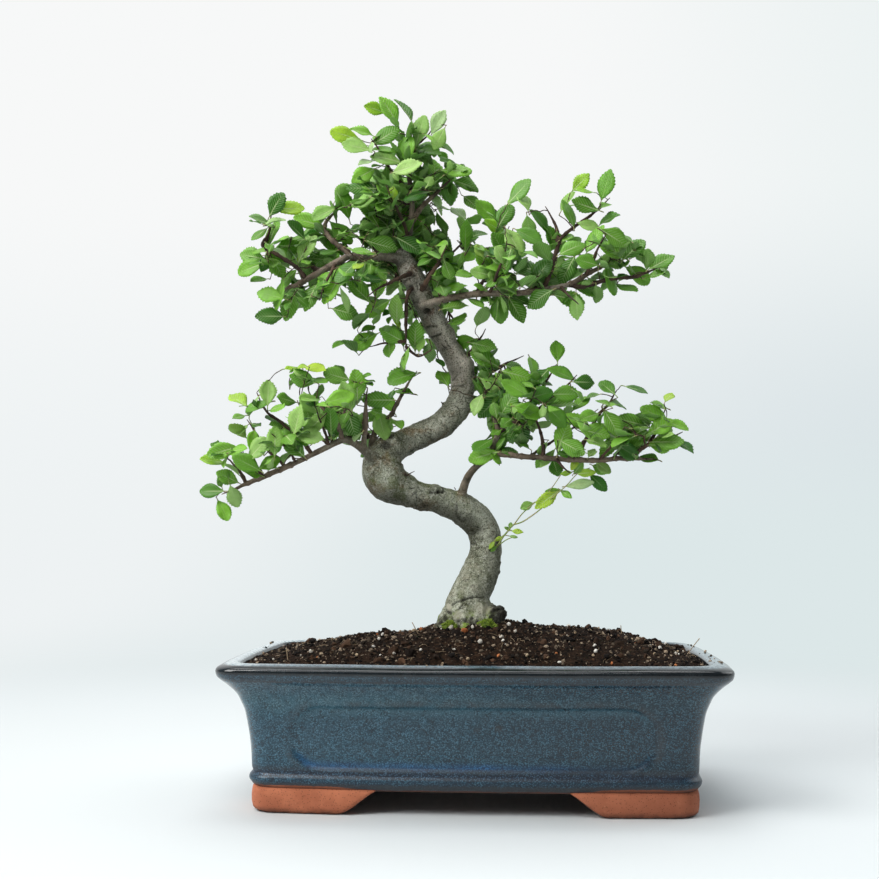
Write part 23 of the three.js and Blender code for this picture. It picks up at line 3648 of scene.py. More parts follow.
def soil_material(name="soil", dark=True):
    m = Nodes(name)
    c = m.coords()
    a = m.noise(c, 160, 5, 0.7)
    b = m.noise(c, 620, 4, 0.7)
    cell = m.cells(c, 520)
    col = m.mix(m.ramp(a, 0.35, 0.65), rgb(11, 8, 7), rgb(46, 33, 25))
    col = m.mix(m.ramp(b, 0.57, 0.70, 0.0, 0.75), col, rgb(104, 78, 58))
    col = m.mix(m.ramp(cell, 0.0, 0.5, 0.55, 0.0), col, rgb(14, 10, 8))
    col = m.mix(m.ramp(m.noise(c, 1500, 2, 0.6), 0.68, 0.76, 0.0, 0.5), col, rgb(160, 140, 114))
    h = m.math("ADD", m.math("MULTIPLY", b, 1.0), m.math("MULTIPLY", a, 0.8))
    return m.done(m.principled(col, 0.92, m.bump(h, 0.9, 0.0012), Specular_IOR_Level=0.06))


def grain_material(name, low, high, rough=0.85, fleck=None):
    """Small grains: each has its own shade between two colours."""
    m = Nodes(name)
    c = m.coords()
    tone = m.attr("tone")
    n = m.noise(c, 900, 4, 0.65)
    col = m.mix(tone, low, high)
    col = m.mix(m.ramp(n, 0.45, 0.7, 0.0, 0.55), col, m.mix(0.6, col, fleck or rgb(24, 18, 14)))
    return m.done(m.principled(col, rough, m.bump(n, 0.7, 0.0005), Specular_IOR_Level=0.14))


def moss_material():
    m = Nodes("moss")
    c = m.coords()
    tone = m.attr("tone")
    n = m.noise(c, 800, 3, 0.6)
    col = m.mix(tone, rgb(78, 104, 24), rgb(158, 182, 58))
    col = m.mix(m.ramp(n, 0.4, 0.7, 0.0, 0.5), col, rgb(52, 66, 22))
    return m.done(m.principled(col, 0.8, m.bump(n, 0.5, 0.0004)))


def net_material():
    m = Nodes("net")
    c = m.coords()
    n = m.noise(c, 700, 3, 0.6)
    col = m.mix(n, rgb(20, 22, 23), rgb(44, 46, 48))
    return m.done(m.principled(col, 0.55, m.bump(n, 0.3, 0.0003)))


GLAZE = glaze_material()
BARK = bark_material("bark")
LIMB = bark_material("limb_bark", "limb")
TWIG = bark_material("twig_bark", "twig")
LEAF = leaf_material()
STEM = stem_material()
SOIL = soil_material()
MOSS = moss_material()
NET = net_material()


# ---- pot -----------------------------------------------------------------
POT_W, POT_D, CORNER_R, RIM_BOW, SHORT_BOW = 300.0, 181.0, 12.5, 6.0, 0.6
PANEL_L, PANEL_H, PANEL_Z, PANEL_DEPTH = 108.0, 19.0, 44.6, 1.9
FRONT_GAP, SIDE_GAP = (76.3, 56.5), (42.0, 25.0)
DRAIN_X, DRAIN_R = 72.0, 9.0
POT_OUT = [(12.9, 84.0), (12.3, 86.2), (11.0, 87.7), (9.2, 88.1), (6.8, 87.9), (4.6, 87.3), (2.6, 86.7), (1.0, 85.8), (0.25, 84.9), (0.0, 83.8), (0.2, 82.2), (0.6, 80.8),
           (1.1, 79.8), (1.9, 79.0), (3.2, 77.6), (4.9, 76.1), (8.2, 72.4), (10.8, 68.6), (12.9, 63.6), (14.8, 57.8), (16.6, 47.5), (17.5, 40.0), (18.0, 34.0), (18.3, 28.5),
           (18.5, 25.2), (18.9, 23.9), (18.8, 23.0), (18.0, 22.1), (17.25, 21.0), (17.1, 19.6), (17.5, 18.2), (18.2, 16.9), (19.0, 15.7), (20.2, 14.5), (21.8, 13.7), (24.0, 13.4)]
POT_IN = [(33.0, 21.0), (30.8, 21.8), (29.5, 23.5), (28.2, 27.0), (27.5, 31.0), (25.8, 46.0), (23.0, 60.0), (18.6, 70.5), (15.0, 79.0)]


def plan(long_n, short_n, corner_n):
    """Parameters of the plan outline, anticlockwise from the back right: (kind, s, corner)."""
    out = []

    def side(n, f):
        out.extend(f(i / n) for i in range(n))

    def arc(q):
        out.extend(("c", q * math.pi / 2 + i / corner_n * math.pi / 2, q) for i in range(corner_n))

    side(long_n, lambda t: ("l", 1 - 2 * t, 1))
    arc(1)
    side(short_n, lambda t: ("s", -1, 1 - 2 * t))
    arc(2)
    side(long_n, lambda t: ("l", -1 + 2 * t, -1))
    arc(3)
    side(short_n, lambda t: ("s", 1, -1 + 2 * t))
    arc(0)
    return out


def outline(pl, inset):
    """Places on the plan at an inset from the rim (one number, or one per plan point)."""
    inset = np.broadcast_to(np.asarray(inset, float), (len(pl),))
    xy = np.empty((len(pl), 2))
    for i, (kind, p, q) in enumerate(pl):
        a, b = POT_W / 2 - inset[i], POT_D / 2 - inset[i]
        r = min(CORNER_R, b * 0.5)
        bow = RIM_BOW * (1 - inset[i] / 90)
        if kind == "c":
            x = (1, -1, -1, 1)[q] * (a - r) + r * math.cos(p)
            y = (1, 1, -1, -1)[q] * (b - r) + r * math.sin(p)
        elif kind == "l":
            x, y = p * (a - r), q * b
        else:
            x, y = p * a, q * (b - r)
        xy[i] = x + math.copysign(bow * SHORT_BOW * (1 - (y / b) ** 2), x), y + math.copysign(bow * (1 - (x / a) ** 2), y)
    return xy


def resample(rows, step):
    p = np.asarray([(a, b, 0.0) for a, b in rows])
    c = curve_through(p, step)
    return c[:, :2]


def panel_cut(x, z):
    """How far the sunk panel lies below the wall, at that place on the front or back."""
    d = np.hypot(np.maximum(np.abs(x) - (PANEL_L - PANEL_H), 0), z - PANEL_Z) - PANEL_H
    dip = smooth(0.3, -1.9, d)
    pillow = 0.35 * smooth(-2.0, -11.0, d)
    lip = 0.30 * np.exp(-(((d - 1.0) / 1.1) ** 2))
    return PANEL_DEPTH * dip - pillow - lip


def pot():
    pl = plan(136, 30, 8)
    n = len(pl)
    rows = [(i, z) for i, z in POT_IN[::1]]
    inner = resample(rows + [POT_OUT[0]], 3.2)[:-1]
    outer = resample(POT_OUT, 1.35)
    prof = np.vstack([inner, outer])
    verts = []
    is_long = np.array([p[0] == "l" for p in pl])
    for inset, z in prof:
        xy = outline(pl, inset)
        ins = np.full(n, inset)
        if 22 < z < 72 and inset < 20:
            ins = ins + np.where(is_long, panel_cut(xy[:, 0], z), 0)
        p3 = np.column_stack([xy, np.full(n, z)])
        if inset < 24.5:
            ins = ins + 0.16 * noise(p3, 17, 3) + 0.06 * noise(p3, 5, 4)
            p3[:, 2] += 0.14 * noise(p3, 24, 9) * (15 < z)
        xy = outline(pl, ins)
        p3[:, :2] = xy
        verts.append(p3)
    m = len(verts)
    v = np.vstack(verts)
    i = (np.arange(m - 1) * n)[:, None]
    j = np.arange(n)[None, :]
    k = (j + 1) % n
    quads = np.stack([i + j, i + k, i + n + k, i + n + j], -1).reshape(-1, 4)
    # floor and underside, each with the two drainage holes
    holes = []
    tris = []
    base = len(v)
    extra = []
    seg = 28
    a = np.arange(seg) / seg * 2 * np.pi
    for z, ring0 in ((21.0, 0), (13.4, (m - 1) * n)):
        loops = [[Vector((*v[ring0 + q][:2], 0)) for q in range(n)]]
        index = [ring0 + q for q in range(n)]
        for hx in (-DRAIN_X, DRAIN_X):
            start = base + sum(len(e) for e in extra)
            pts = np.column_stack([hx + DRAIN_R * np.cos(a), DRAIN_R * np.sin(a), np.full(seg, z)])
            extra.append(pts)
            loops.append([Vector((p[0], p[1], 0)) for p in pts])
            index.extend(range(start, start + seg))
            holes.append(start)
        for t in tessellate_polygon(loops):
            tris.append([index[q] for q in t])
    hq = []
    for top, low in ((holes[0], holes[2]), (holes[1], holes[3])):
        for q in range(seg):
            r = (q + 1) % seg
            hq.append([top + q, top + r, low + r, low + q])
    v = np.vstack([v] + extra)
    pile = Pile()
    pile.add(v, np.vstack([quads, hq]), np.array(tris))
    # four L-shaped feet
    loop = [(22.9, 0.0), (21.4, 0.25), (20.1, 0.95), (19.3, 2.0), (18.9, 3.6), (18.6, 5.6), (18.5, 9.0), (18.7, 12.0), (19.1, 14.2), (20.6, 15.6), (25.0, 16.4), (31.0, 16.4),
            (35.0, 15.0), (35.0, 11.0), (34.9, 7.0), (34.5, 3.4), (33.7, 1.3), (32.3, 0.3), (30.4, 0.0), (26.6, 0.0)]
    loop = np.array(loop)
    for sx in (-1, 1):
        for sy in (-1, 1):
            stations = []
            na, nc, ns = 34, 12, 16
            for q in range(na + 1):
                stations.append(("l", q / na))
            for q in range(1, nc):
                stations.append(("c", q / nc))
            for q in range(ns + 1):
                stations.append(("s", q / ns))
            grid = []
            total = len(stations)
            for si, (kind, t) in enumerate(stations):
                row = []
                # ends are rounded over
                if kind == "l" and t < 0.14:
                    e = (t * na) / 5.0
                elif kind == "s" and t > 0.70:
                    e = ((1 - t) * ns) / 5.0
                else:
                    e = 1.0
                shrink = 2.2 * (1 - math.sqrt(max(0.0, 1 - (1 - min(e, 1.0)) ** 2)))
                for inset, z in loop:
                    mid = 27.0
                    ii = inset + shrink if inset < mid else inset - shrink
                    zz = z + shrink * 0.5 if z < 3 else z
                    aa, bb = POT_W / 2 - ii, POT_D / 2 - ii
                    r = min(CORNER_R, bb * 0.5) if ii < mid else 4.0
                    f = float(np.interp(zz, [0, 7.4, 11.4, 13.4, 17], [0, 0.55, 0.78, 1.0, 1.15]))
                    gx = FRONT_GAP[0] + (FRONT_GAP[1] - FRONT_GAP[0]) * f
                    gy = SIDE_GAP[0] + (SIDE_GAP[1] - SIDE_GAP[0]) * f
                    # stations crowd towards the ends
                    if kind == "l":
                        tt = t if t >= 0.14 else 0.14 * (t / 0.14) ** 1.6
                        x, y = gx + (aa - r - gx) * tt, bb
                    elif kind == "c":
                        w = math.pi / 2 * (1 - t)
                        x, y = aa - r + r * math.cos(w), bb - r + r * math.sin(w)
                    else:
                        tt = t if t <= 0.70 else 1 - 0.30 * ((1 - t) / 0.30) ** 1.6
                        x, y = aa, (bb - r) + (gy - (bb - r)) * tt
                    bow = RIM_BOW * (1 - ii / 90)
                    x2 = x + bow * SHORT_BOW * (1 - (y / bb) ** 2)
                    y2 = y + bow * (1 - (x / aa) ** 2)
                    row.append((sx * x2, sy * y2, zz))
                grid.append(row)
            g = np.array(grid)
            L = g.shape[1]
            gv = g.reshape(-1, 3)
            gv = gv + 0.12 * np.column_stack([noise(gv, 6, 31), noise(gv, 6, 32), np.zeros(len(gv))])
            gi = (np.arange(total - 1) * L)[:, None]
            gj = np.arange(L)[None, :]
            gk = (gj + 1) % L
            gq = np.stack([gi + gj, gi + gk, gi + L + gk, gi + L + gj], -1).reshape(-1, 4)
            c0, c1 = gv[:L].mean(0), gv[-L:].mean(0)
            gv = np.vstack([gv, c0, c1])
            jj = np.arange(L)
            kk = (jj + 1) % L
            gt = np.vstack([np.stack([np.full(L, total * L), kk, jj], -1), np.stack([np.full(L, total * L + 1), (total - 1) * L + jj, (total - 1) * L + kk], -1)])
            pile.add(gv, gq, gt)
    return pile.make("glazed_pot", [GLAZE], slot="pot_glaze", replaces=("pot",), sharp=50, recalc=True)


POT = pot()


# ---- drainage meshes -----------------------------------------------------
def drain_net(name, node, x):
    """A square of plastic net: crossing round strands, joined where they cross."""
    pile = Pile()
    half, count, r = 15.8, 13, 0.34
    for i in range(count):
        s = -half + 2 * half * i / (count - 1)
        line = np.linspace(-half, half, 14)
        wob = 0.08 * np.sin(line * 1.7 + i)
        v, q, t = tube(np.column_stack([x + line, s + wob, 21.75 + 0 * line]), np.full(14, r), 6)
        pile.add(v, q, t)
        v, q, t = tube(np.column_stack([x + s + wob, line, 21.95 + 0 * line]), np.full(14, r), 6)
        pile.add(v, q, t)
    pile.make(name, [NET], slot="net", replaces=(node,))


drain_net("net_left", "drain_mesh_left", -DRAIN_X)
drain_net("net_right", "drain_mesh_right", DRAIN_X)


# ---- soil ----------------------------------------------------------------
RIDGE = [(-150, 85), (-135, 86.5), (-112, 91.5), (-90, 95.5), (-68, 98.3), (-44, 100.3), (-33, 102.5), (-26, 105), (-3, 107.6),
         (18, 107.8), (29, 105.9), (51, 103.6), (75, 103), (94, 99.6), (107, 95.6), (120, 92.4), (132, 89), (142, 86), (150, 85)]
SOIL_EDGE = 85.6


def soil_top(x, y, rough=True):
    x, y = np.asarray(x, float), np.asarray(y, float)
    r = np.array(RIDGE, float)
    ridge = np.interp(x, r[:, 0], r[:, 1])
    f = np.clip(1 - (np.abs(y) / 84) ** 2.1, 0, None)
    z = SOIL_EDGE + (ridge - SOIL_EDGE) * f + 0.5 * np.sin(x * 0.31 + y * 0.17) * f
    if rough:
        p = np.column_stack([x.ravel(), y.ravel(), 0 * x.ravel()])
        z = z + (0.75 * fbm(p, 11, 4, 40) + 0.35 * fbm(p, 2.6, 2, 50)).reshape(z.shape)
    return z


def soil():
    pl = plan(92, 50, 6)
    n = len(pl)
    ring = outline(pl, 13.3)
    ring = ring + 0.25 * np.column_stack([noise(np.column_stack([ring, np.zeros(n)]), 5, 60), noise(np.column_stack([ring, np.zeros(n)]), 5, 61)])
    scales = np.concatenate([np.linspace(1, 0.04, 44)])
    rows = []
    for z, inset in ((21.6, 33.8), (24.5, 30.2), (31, 28.0), (46, 26.3), (60, 23.5), (70.5, 19.1), (79, 15.5), (83.5, 13.7)):
        rows.append(np.column_stack([outline(pl, inset), np.full(n, z)]))
    for s in scales:
        xy = ring * s
        z = soil_top(xy[:, 0], xy[:, 1])
        if s > 0.99:
            z = np.minimum(z, 85.4)
        rows.append(np.column_stack([xy, z]))
    m = len(rows)
    v = np.vstack(rows + [np.array([[0, 0, soil_top(np.zeros(1), np.zeros(1))[0]]]), np.array([[0, 0, 21.6]])])
    i = (np.arange(m - 1) * n)[:, None]
    j = np.arange(n)[None, :]
    k = (j + 1) % n
    quads = np.stack([i + j, i + k, i + n + k, i + n + j], -1).reshape(-1, 4)
    jj = np.arange(n)
    kk = (jj + 1) % n
    tris = np.vstack([np.stack([np.full(n, m * n), (m - 1) * n + jj, (m - 1) * n + kk], -1), np.stack([np.full(n, m * n + 1), kk, jj], -1)])
    build("potting_soil", v, [quads, tris], [SOIL], slot="soil", replaces=("soil",), recalc=True)


soil()

ICO_V = np.array([(0, 0, -1), (0.7236, -0.5257, -0.4472), (-0.2764, -0.8506, -0.4472), (-0.8944, 0, -0.4472), (-0.2764, 0.8506, -0.4472), (0.7236, 0.5257, -0.4472),
                  (0.2764, -0.8506, 0.4472), (-0.7236, -0.5257, 0.4472), (-0.7236, 0.5257, 0.4472), (0.2764, 0.8506, 0.4472), (0.8944, 0, 0.4472), (0, 0, 1)])
ICO_F = np.array([(0, 1, 5), (1, 0, 2), (0, 3, 2), (0, 4, 3), (0, 5, 4), (1, 10, 5), (1, 2, 6), (2, 3, 7), (3, 4, 8), (4, 5, 9), (1, 6, 10), (2, 7, 6), (3, 8, 7),
                  (4, 9, 8), (5, 10, 9), (6, 11, 10), (6, 7, 11), (7, 8, 11), (8, 9, 11), (9, 10, 11)])
ICO_F = ICO_F[:, ::-1]


def finer(v, f):
    """Each triangle split in four and pushed out to the sphere."""
    cache, v = {}, [tuple(p) for p in v]

    def mid(a, b):
        key = (min(a, b), max(a, b))
        if key not in cache:
            p = np.array(v[a]) + np.array(v[b])
            v.append(tuple(p / np.linalg.norm(p)))
            cache[key] = len(v) - 1
        return cache[key]

    out = []
    for a, b, c in f:
        ab, bc, ca = mid(a, b), mid(b, c), mid(c, a)
        out += [(a, ab, ca), (b, bc, ab), (c, ca, bc), (ab, bc, ca)]
    return np.array(v), np.array(out)


ICO2_V, ICO2_F = finer(ICO_V, ICO_F)
ICO3_V, ICO3_F = finer(ICO2_V, ICO2_F)


def turn(r):
    """A random rotation matrix."""
    q = r.normal(size=4)
    q /= np.linalg.norm(q)
    w, x, y, z = q
    return np.array([[1 - 2 * (y * y + z * z), 2 * (x * y - z * w), 2 * (x * z + y * w)],
                     [2 * (x * y + z * w), 1 - 2 * (x * x + z * z), 2 * (y * z - x * w)],
                     [2 * (x * z - y * w), 2 * (y * z + x * w), 1 - 2 * (x * x + y * y)]])


def grain(centre, size, r, level=0, lump=0.35, stretch=(0.6, 1.0)):
    """An irregular crumb: a rounded solid stretched, lumped and turned at random."""
    v, f = ((ICO_V, ICO_F), (ICO2_V, ICO2_F), (ICO3_V, ICO3_F))[level]
    s = np.array([1.0, r.uniform(*stretch), r.uniform(*stretch)])
    k = r.uniform(0, 100)
    d = 1 + lump * noise(v * 1.0 + k, 0.9, 7) + 0.5 * lump * noise(v + k, 0.4, 8)
    return (v * d[:, None] * s * size) @ turn(r).T + centre, f


def in_pot(x, y, margin=14.5):
    a, b = POT_W / 2 - margin, POT_D / 2 - margin
    return (abs(x) < a + 3.0 * (1 - (y / b) ** 2)) & (abs(y) < b + 5.0 * (1 - (x / a) ** 2))


def crumbs():
    """Peat crumbs and bark chips over the whole soil surface, and a few that lie on the rim."""
    r = np.random.default_rng(31)
    pile = Pile()
    made = 0
    while made < 4900:
        x, y = r.uniform(-139, 139), r.uniform(-81, 81)
        if not in_pot(x, y):
            continue
        if math.hypot(x + 4, y) < 19 or r.random() > (1.0 if y < 10 else 0.62):
            continue
        s = float(np.clip(r.lognormal(-0.52, 0.46), 0.28, 1.7))
        z = float(soil_top(np.array([x]), np.array([y]))[0])
        v, f = grain(np.array([x, y, z + s * r.uniform(-0.15, 0.45)]), s, r, 0, 0.3, (0.45, 1.0))
        pile.add(v, None, f, tone=r.random() ** 4.6)
        made += 1
    for x, y, z, s in RIM_CRUMBS:
        v, f = grain(np.array([x, y, z + s * 0.3]), s, r, 1, 0.4)
        pile.add(v, None, f, tone=r.random() ** 1.5)
    pile.make("soil_crumbs", [grain_material("crumbs", rgb(15, 11, 9), rgb(176, 156, 134))], slot="soil", smooth=False)


def chips():
    """Larger bark chips and clods half sunk in the soil."""
    r = np.random.default_rng(33)
    pile = Pile()
    made = 0
    while made < 330:
        x, y = r.uniform(-136, 136), r.uniform(-79, 79)
        if not in_pot(x, y, 17) or math.hypot(x + 4, y) < 21:
            continue
        s = float(np.clip(r.lognormal(0.64, 0.38), 1.1, 3.9))
        z = float(soil_top(np.array([x]), np.array([y]))[0])
        v, f = grain(np.array([x, y, z + s * r.uniform(-0.45, 0.05)]), s, r, 1, 0.55, (0.40, 0.95))
        pile.add(v, None, f, tone=r.random() ** 2.4)
        made += 1
    pile.make("soil_chips", [grain_material("chips", rgb(16, 12, 10), rgb(92, 68, 52))], slot="soil", smooth=False)


def fibres():
    """Fine rootlets and peat fibres that lie on the soil, and the few long straws."""
    r = np.random.default_rng(35)
    pile = Pile()
    made = 0
    while made < 150:
        x, y = r.uniform(-135, 135), r.uniform(-78, 78)
        if not in_pot(x, y, 18) or math.hypot(x + 4, y) < 22:
            continue
        a, length = r.uniform(0, 2 * np.pi), r.uniform(3, 9)
        t = np.linspace(-0.5, 0.5, 7)
        px = x + np.cos(a) * t * length + 0.5 * np.sin(t * 7 + a)
        py = y + np.sin(a) * t * length + 0.5 * np.cos(t * 6 + a)
        pz = soil_top(px, py) + 0.35 + 0.8 * r.random() * np.cos(t * np.pi)
        v, q, tr = tube(np.column_stack([px, py, pz]), np.full(7, r.uniform(0.08, 0.17)), 4)
        pile.add(v, q, tr, tone=r.random())
        made += 1
    for line, rad in STRAWS:
        c = curve_through(np.array(line, float), 1.2)
        v, q, tr = tube(c, np.full(len(c), rad), 6)
        pile.add(v, q, tr, tone=0.95)
    pile.make("soil_fibres", [grain_material("fibres", rgb(72, 54, 42), rgb(164, 144, 118), 0.8)], slot="soil")


def pebbles():
    """Pale perlite, beige grit and orange clay grains pressed into the soil."""
    r = np.random.default_rng(37)
    mats = [grain_material("perlite", rgb(196, 190, 178), rgb(236, 232, 224), 0.8, rgb(120, 108, 96)),
            grain_material("beige_grit", rgb(150, 128, 102), rgb(196, 176, 148), 0.75, rgb(96, 76, 58)),
            grain_material("clay_grit", rgb(150, 84, 48), rgb(196, 124, 78), 0.8, rgb(90, 52, 34))]
    pile = Pile()
    for x, y, s, kind in PEBBLES:
        z = float(soil_top(np.array([x]), np.array([y]))[0])
        v, f = grain(np.array([x, y, z + 0.55 * s + 0.3]), s * 1.12, r, 2, 0.30, (0.6, 0.95))
        pile.add(v, None, f, mat=kind, tone=r.random())
    made = 0
    while made < 175:
        x, y = r.uniform(-137, 137), r.uniform(-79, 79)
        if not in_pot(x, y, 16) or math.hypot(x + 4, y) < 20:
            continue
        if y < -10 and r.random() < 0.72:
            continue
        z = float(soil_top(np.array([x]), np.array([y]))[0])
        s = float(np.clip(r.lognormal(-0.35, 0.40), 0.35, 1.6))
        v, f = grain(np.array([x, y, z + 0.3 * s]), s, r, 1, 0.3)
        pile.add(v, None, f, mat=int(r.choice(3, p=[0.52, 0.34, 0.14])), tone=r.random())
        made += 1
    pile.make("soil_grit", mats, slot="soil")


crumbs()
chips()
fibres()
pebbles()


# ---- wood ----------------------------------------------------------------
ROOTS = [[(-6, -2, 118, 7.0), (-12, -6, 112.8, 5.6), (-19.5, -13, 106.4, 4.6), (-28, -18, 99.5, 3)],
         [(1, -2, 119, 6.5), (5, -6, 113.5, 5.2), (11.5, -12.5, 107.4, 4.4), (19, -18, 100.5, 2.8)],
         [(-1, 2, 119, 7.0), (4, 6, 114, 6.0), (12, 13, 106, 4.8), (22, 20, 98, 3)],
         [(-7, 2, 118, 7.0), (-12, 8, 112.8, 5.4), (-19, 17, 104.8, 4.4), (-27, 26, 96.5, 3)],
         [(-4, -4, 118, 7.0), (-5, -12, 111.6, 5.4), (-6, -20.5, 105.8, 4.4), (-7, -29, 99, 2.8)],
         [(3, -3, 115, 5.2), (7.2, -6, 111.4, 4.4), (9.6, -7, 106.8, 4.6), (12, -8, 101, 3.8)],
         [(6, -5, 113.4, 2.0), (10.8, -6, 113.9, 1.5), (14.9, -6, 114.0, 0.9)]]
# Rotten dark wood and soil caught on the right side of the foot.
MARKS = MARKS + [(12.8, -8, 111.0, 6.6, 0.3, 0.97), (13.5, -8, 105.5, 6.0, 0.4, 0.97), (12.2, -9, 116.4, 3.4, 0.3, 0.92), (15.5, -6, 114.6, 4.0, 0.2, 0.95), (14.6, -7, 110.4, 1.6, 0.9, 0.9), (10.2, -13, 108, 3.2, 0.5, 0.92), (-19.0, -10, 110.5, 2.6, -0.3, 0.85),
                 (-17.2, -12, 114.4, 1.8, -0.5, 0.95), (-6.5, -18, 109.8, 2.4, -0.4, 0.92), (-10.5, -18, 109.4, 2.0, -0.3, 0.8), (1.5, -18, 108.2, 2.2, -0.3, 0.85)] + [(-59.8, -6, 219.2, 7.2, -0.5, 0.8), (-64.4, -6, 224.5, 5.0, -0.5, 0.85), (-55.2, -6, 214.0, 4.6, -0.5, 0.7), (-68.4, -6, 229.8, 3.6, -0.5, 0.8)]
# Limbs inside the crown are thinner and darker than the main ones.
INNER = {"lead_f", "lead_b", "back_t", "back_m", "back_r", "back_l", "cen_f", "cen_l", "hang", "kr", "ul_f", "ul_d", "ul_e", "ur_c", "ur_d", "ur_e", "ur_g", "ur_f",
         "ll_g", "ll_h", "ll_i", "ll_j", "lr_g", "lr_i", "lr_j", "lr_h2", "mid_r"}
THIN = 1.75


def wood():
    """The trunk, its limbs and surface roots: thick wood fused into one skin, thin limbs swept on."""
    thick, thin = Pile(), Pile()
    for name, rows in LIMBS:
        c = curve_through(rows, 1.25 if name != "trunk" else 1.6)
        r = np.maximum(c[:, 3], 0.35)
        k = len(c)
        inner = name in INNER
        if inner:
            r = r * 0.66
        while k > 1 and r[k - 1] < THIN:
            k -= 1
        if name == "trunk" or (not inner and k > 3 and r[:k].mean() > THIN + 0.3):
            v, q, t = tube(c[:k, :3], r[:k], 20 if name == "trunk" else 12)
            thick.add(v, q, t)
            start = max(0, k - 4)
        else:
            start = 0
        if start < len(c) - 1 and (start == 0 or k < len(c)):
            cc, rr = c[start:, :3].copy(), r[start:].copy()
            # knuckles where the twigs leave, and small bends between them
            s = np.concatenate([[0], np.cumsum(np.linalg.norm(np.diff(cc, axis=0), axis=1))])
            ph = (abs(hash_name(name)) % 97) / 9.7
            knuckle = np.exp(-(((s + ph) % 7.5 - 3.7) / 0.9) ** 2)
            rr = rr * (1 + 0.30 * knuckle) + 0.05
            # the last part tapers to a bud
            rr = 0.28 + (rr - 0.28) * np.clip((s[-1] - s) / min(s[-1], 20.0), 0, 1) ** 0.75
            fade = smooth(0, 6, s)[:, None]
            cc = cc + fade * 0.35 * np.column_stack([noise(cc, 6, 71), noise(cc, 6, 72), noise(cc, 6, 73)])
            v, q, t = tube(cc, rr, 8)
            thin.add(v, q, t, mat=1 if inner or r[0] < 1.75 else 0)
    for rows in ROOTS:
        c = curve_through(np.array(rows, float), 1.5)
        v, q, t = tube(c[:, :3], c[:, 3], 12)
        thick.add(v, q, t)
    raw = thick.make("raw_wood", [BARK], body=None)
    mod = raw.modifiers.new("fuse", "REMESH")
    mod.mode = "VOXEL"
    mod.voxel_size = 0.00100
    mod.use_smooth_shade = True
    sm = raw.modifiers.new("soften", "SMOOTH")
    sm.factor = 0.5
    sm.iterations = 4
    dg = bpy.context.evaluated_depsgraph_get()
    me = bpy.data.meshes.new_from_object(raw.evaluated_get(dg))
    bpy.data.objects.remove(raw)
    n = len(me.vertices)
    co = np.empty(n * 3)
    me.vertices.foreach_get("co", co)
    co = co.reshape(-1, 3)
    no = np.empty(n * 3)
    me.vertices.foreach_get("normal", no)
    no = no.reshape(-1, 3)
    p = (co - SHIFT) / MM
    # bark relief: broad lumps, plates stretched along the stem, fine grain
    lower = smooth(175, 112, p[:, 2])
    near_r = local_radius(p)
    q = p * np.array([1, 1, 0.5])
    big = smooth(2.5, 9.0, near_r)
    relief = big * (0.55 * fbm(p, 9, 2, 80) + 0.34 * fbm(q, 3.2, 3, 84)) + 0.12 * fbm(q, 1.6, 2, 88) + lower * 0.7 * fbm(q, 7, 3, 91)
    fis = np.abs(noise(q, 4.0, 95))
    relief -= 0.30 * big * smooth(0.12, 0.0, fis)
    scar, pale = np.zeros(n), np.zeros(n)
    for x, y, z, rad, height, dark in MARKS:
        flat = 0.5 if z > 124 else 0.10
        d = np.linalg.norm((p - (x, y, z)) * (1, flat, 1), axis=1) / rad + (0 if z > 124 else 1) * 2.0 * smooth(-0.05, 0.45, no[:, 1])
        if z <= 124:
            d = d * (1 + 0.35 * noise(p, 1.6, 61))
        g = np.exp(-(d**2))
        if height < 0:
            relief += height * np.exp(-(d**2) * 1.3) + 0.45 * -height * np.exp(-((d - 1.25) / 0.42) ** 2)
        else:
            relief += height * g
        if dark > 0:
            scar = np.maximum(scar, dark * smooth(1.0, 0.45, d))
        else:
            pale = np.maximum(pale, -dark * smooth(1.2, 0.6, d))
    for line, rad, height, dark in CREASES:
        line = np.array(line, float)
        near = np.where((np.abs(p - line.mean(0)) < np.abs(line - line.mean(0)).max(0) + (6, 12, 6)).all(1))[0]
        if not len(near):
            continue
        flat = p[near] * (1, 0.15, 1)
        wob = 0.35 * noise(p[near], 2.2, 57)
        d = np.full(len(near), 1e9)
        for a, b in zip(line[:-1] * (1, 0.15, 1), line[1:] * (1, 0.15, 1)):
            ab = b - a
            t = np.clip(((flat - a) @ ab) / (ab @ ab + 1e-9), 0, 1)
            d = np.minimum(d, np.linalg.norm(flat - a - t[:, None] * ab, axis=1))
        d = (d + wob * rad) / rad
        relief[near] += height * np.exp(-(d**2)) + 0.30 * abs(height) * np.exp(-((d - 1.9) / 0.7) ** 2)
        if dark > 0:
            scar[near] = np.maximum(scar[near], dark * smooth(1.25, 0.35, d))
        else:
            pale[near] = np.maximum(pale[near], -dark * smooth(1.25, 0.35, d))
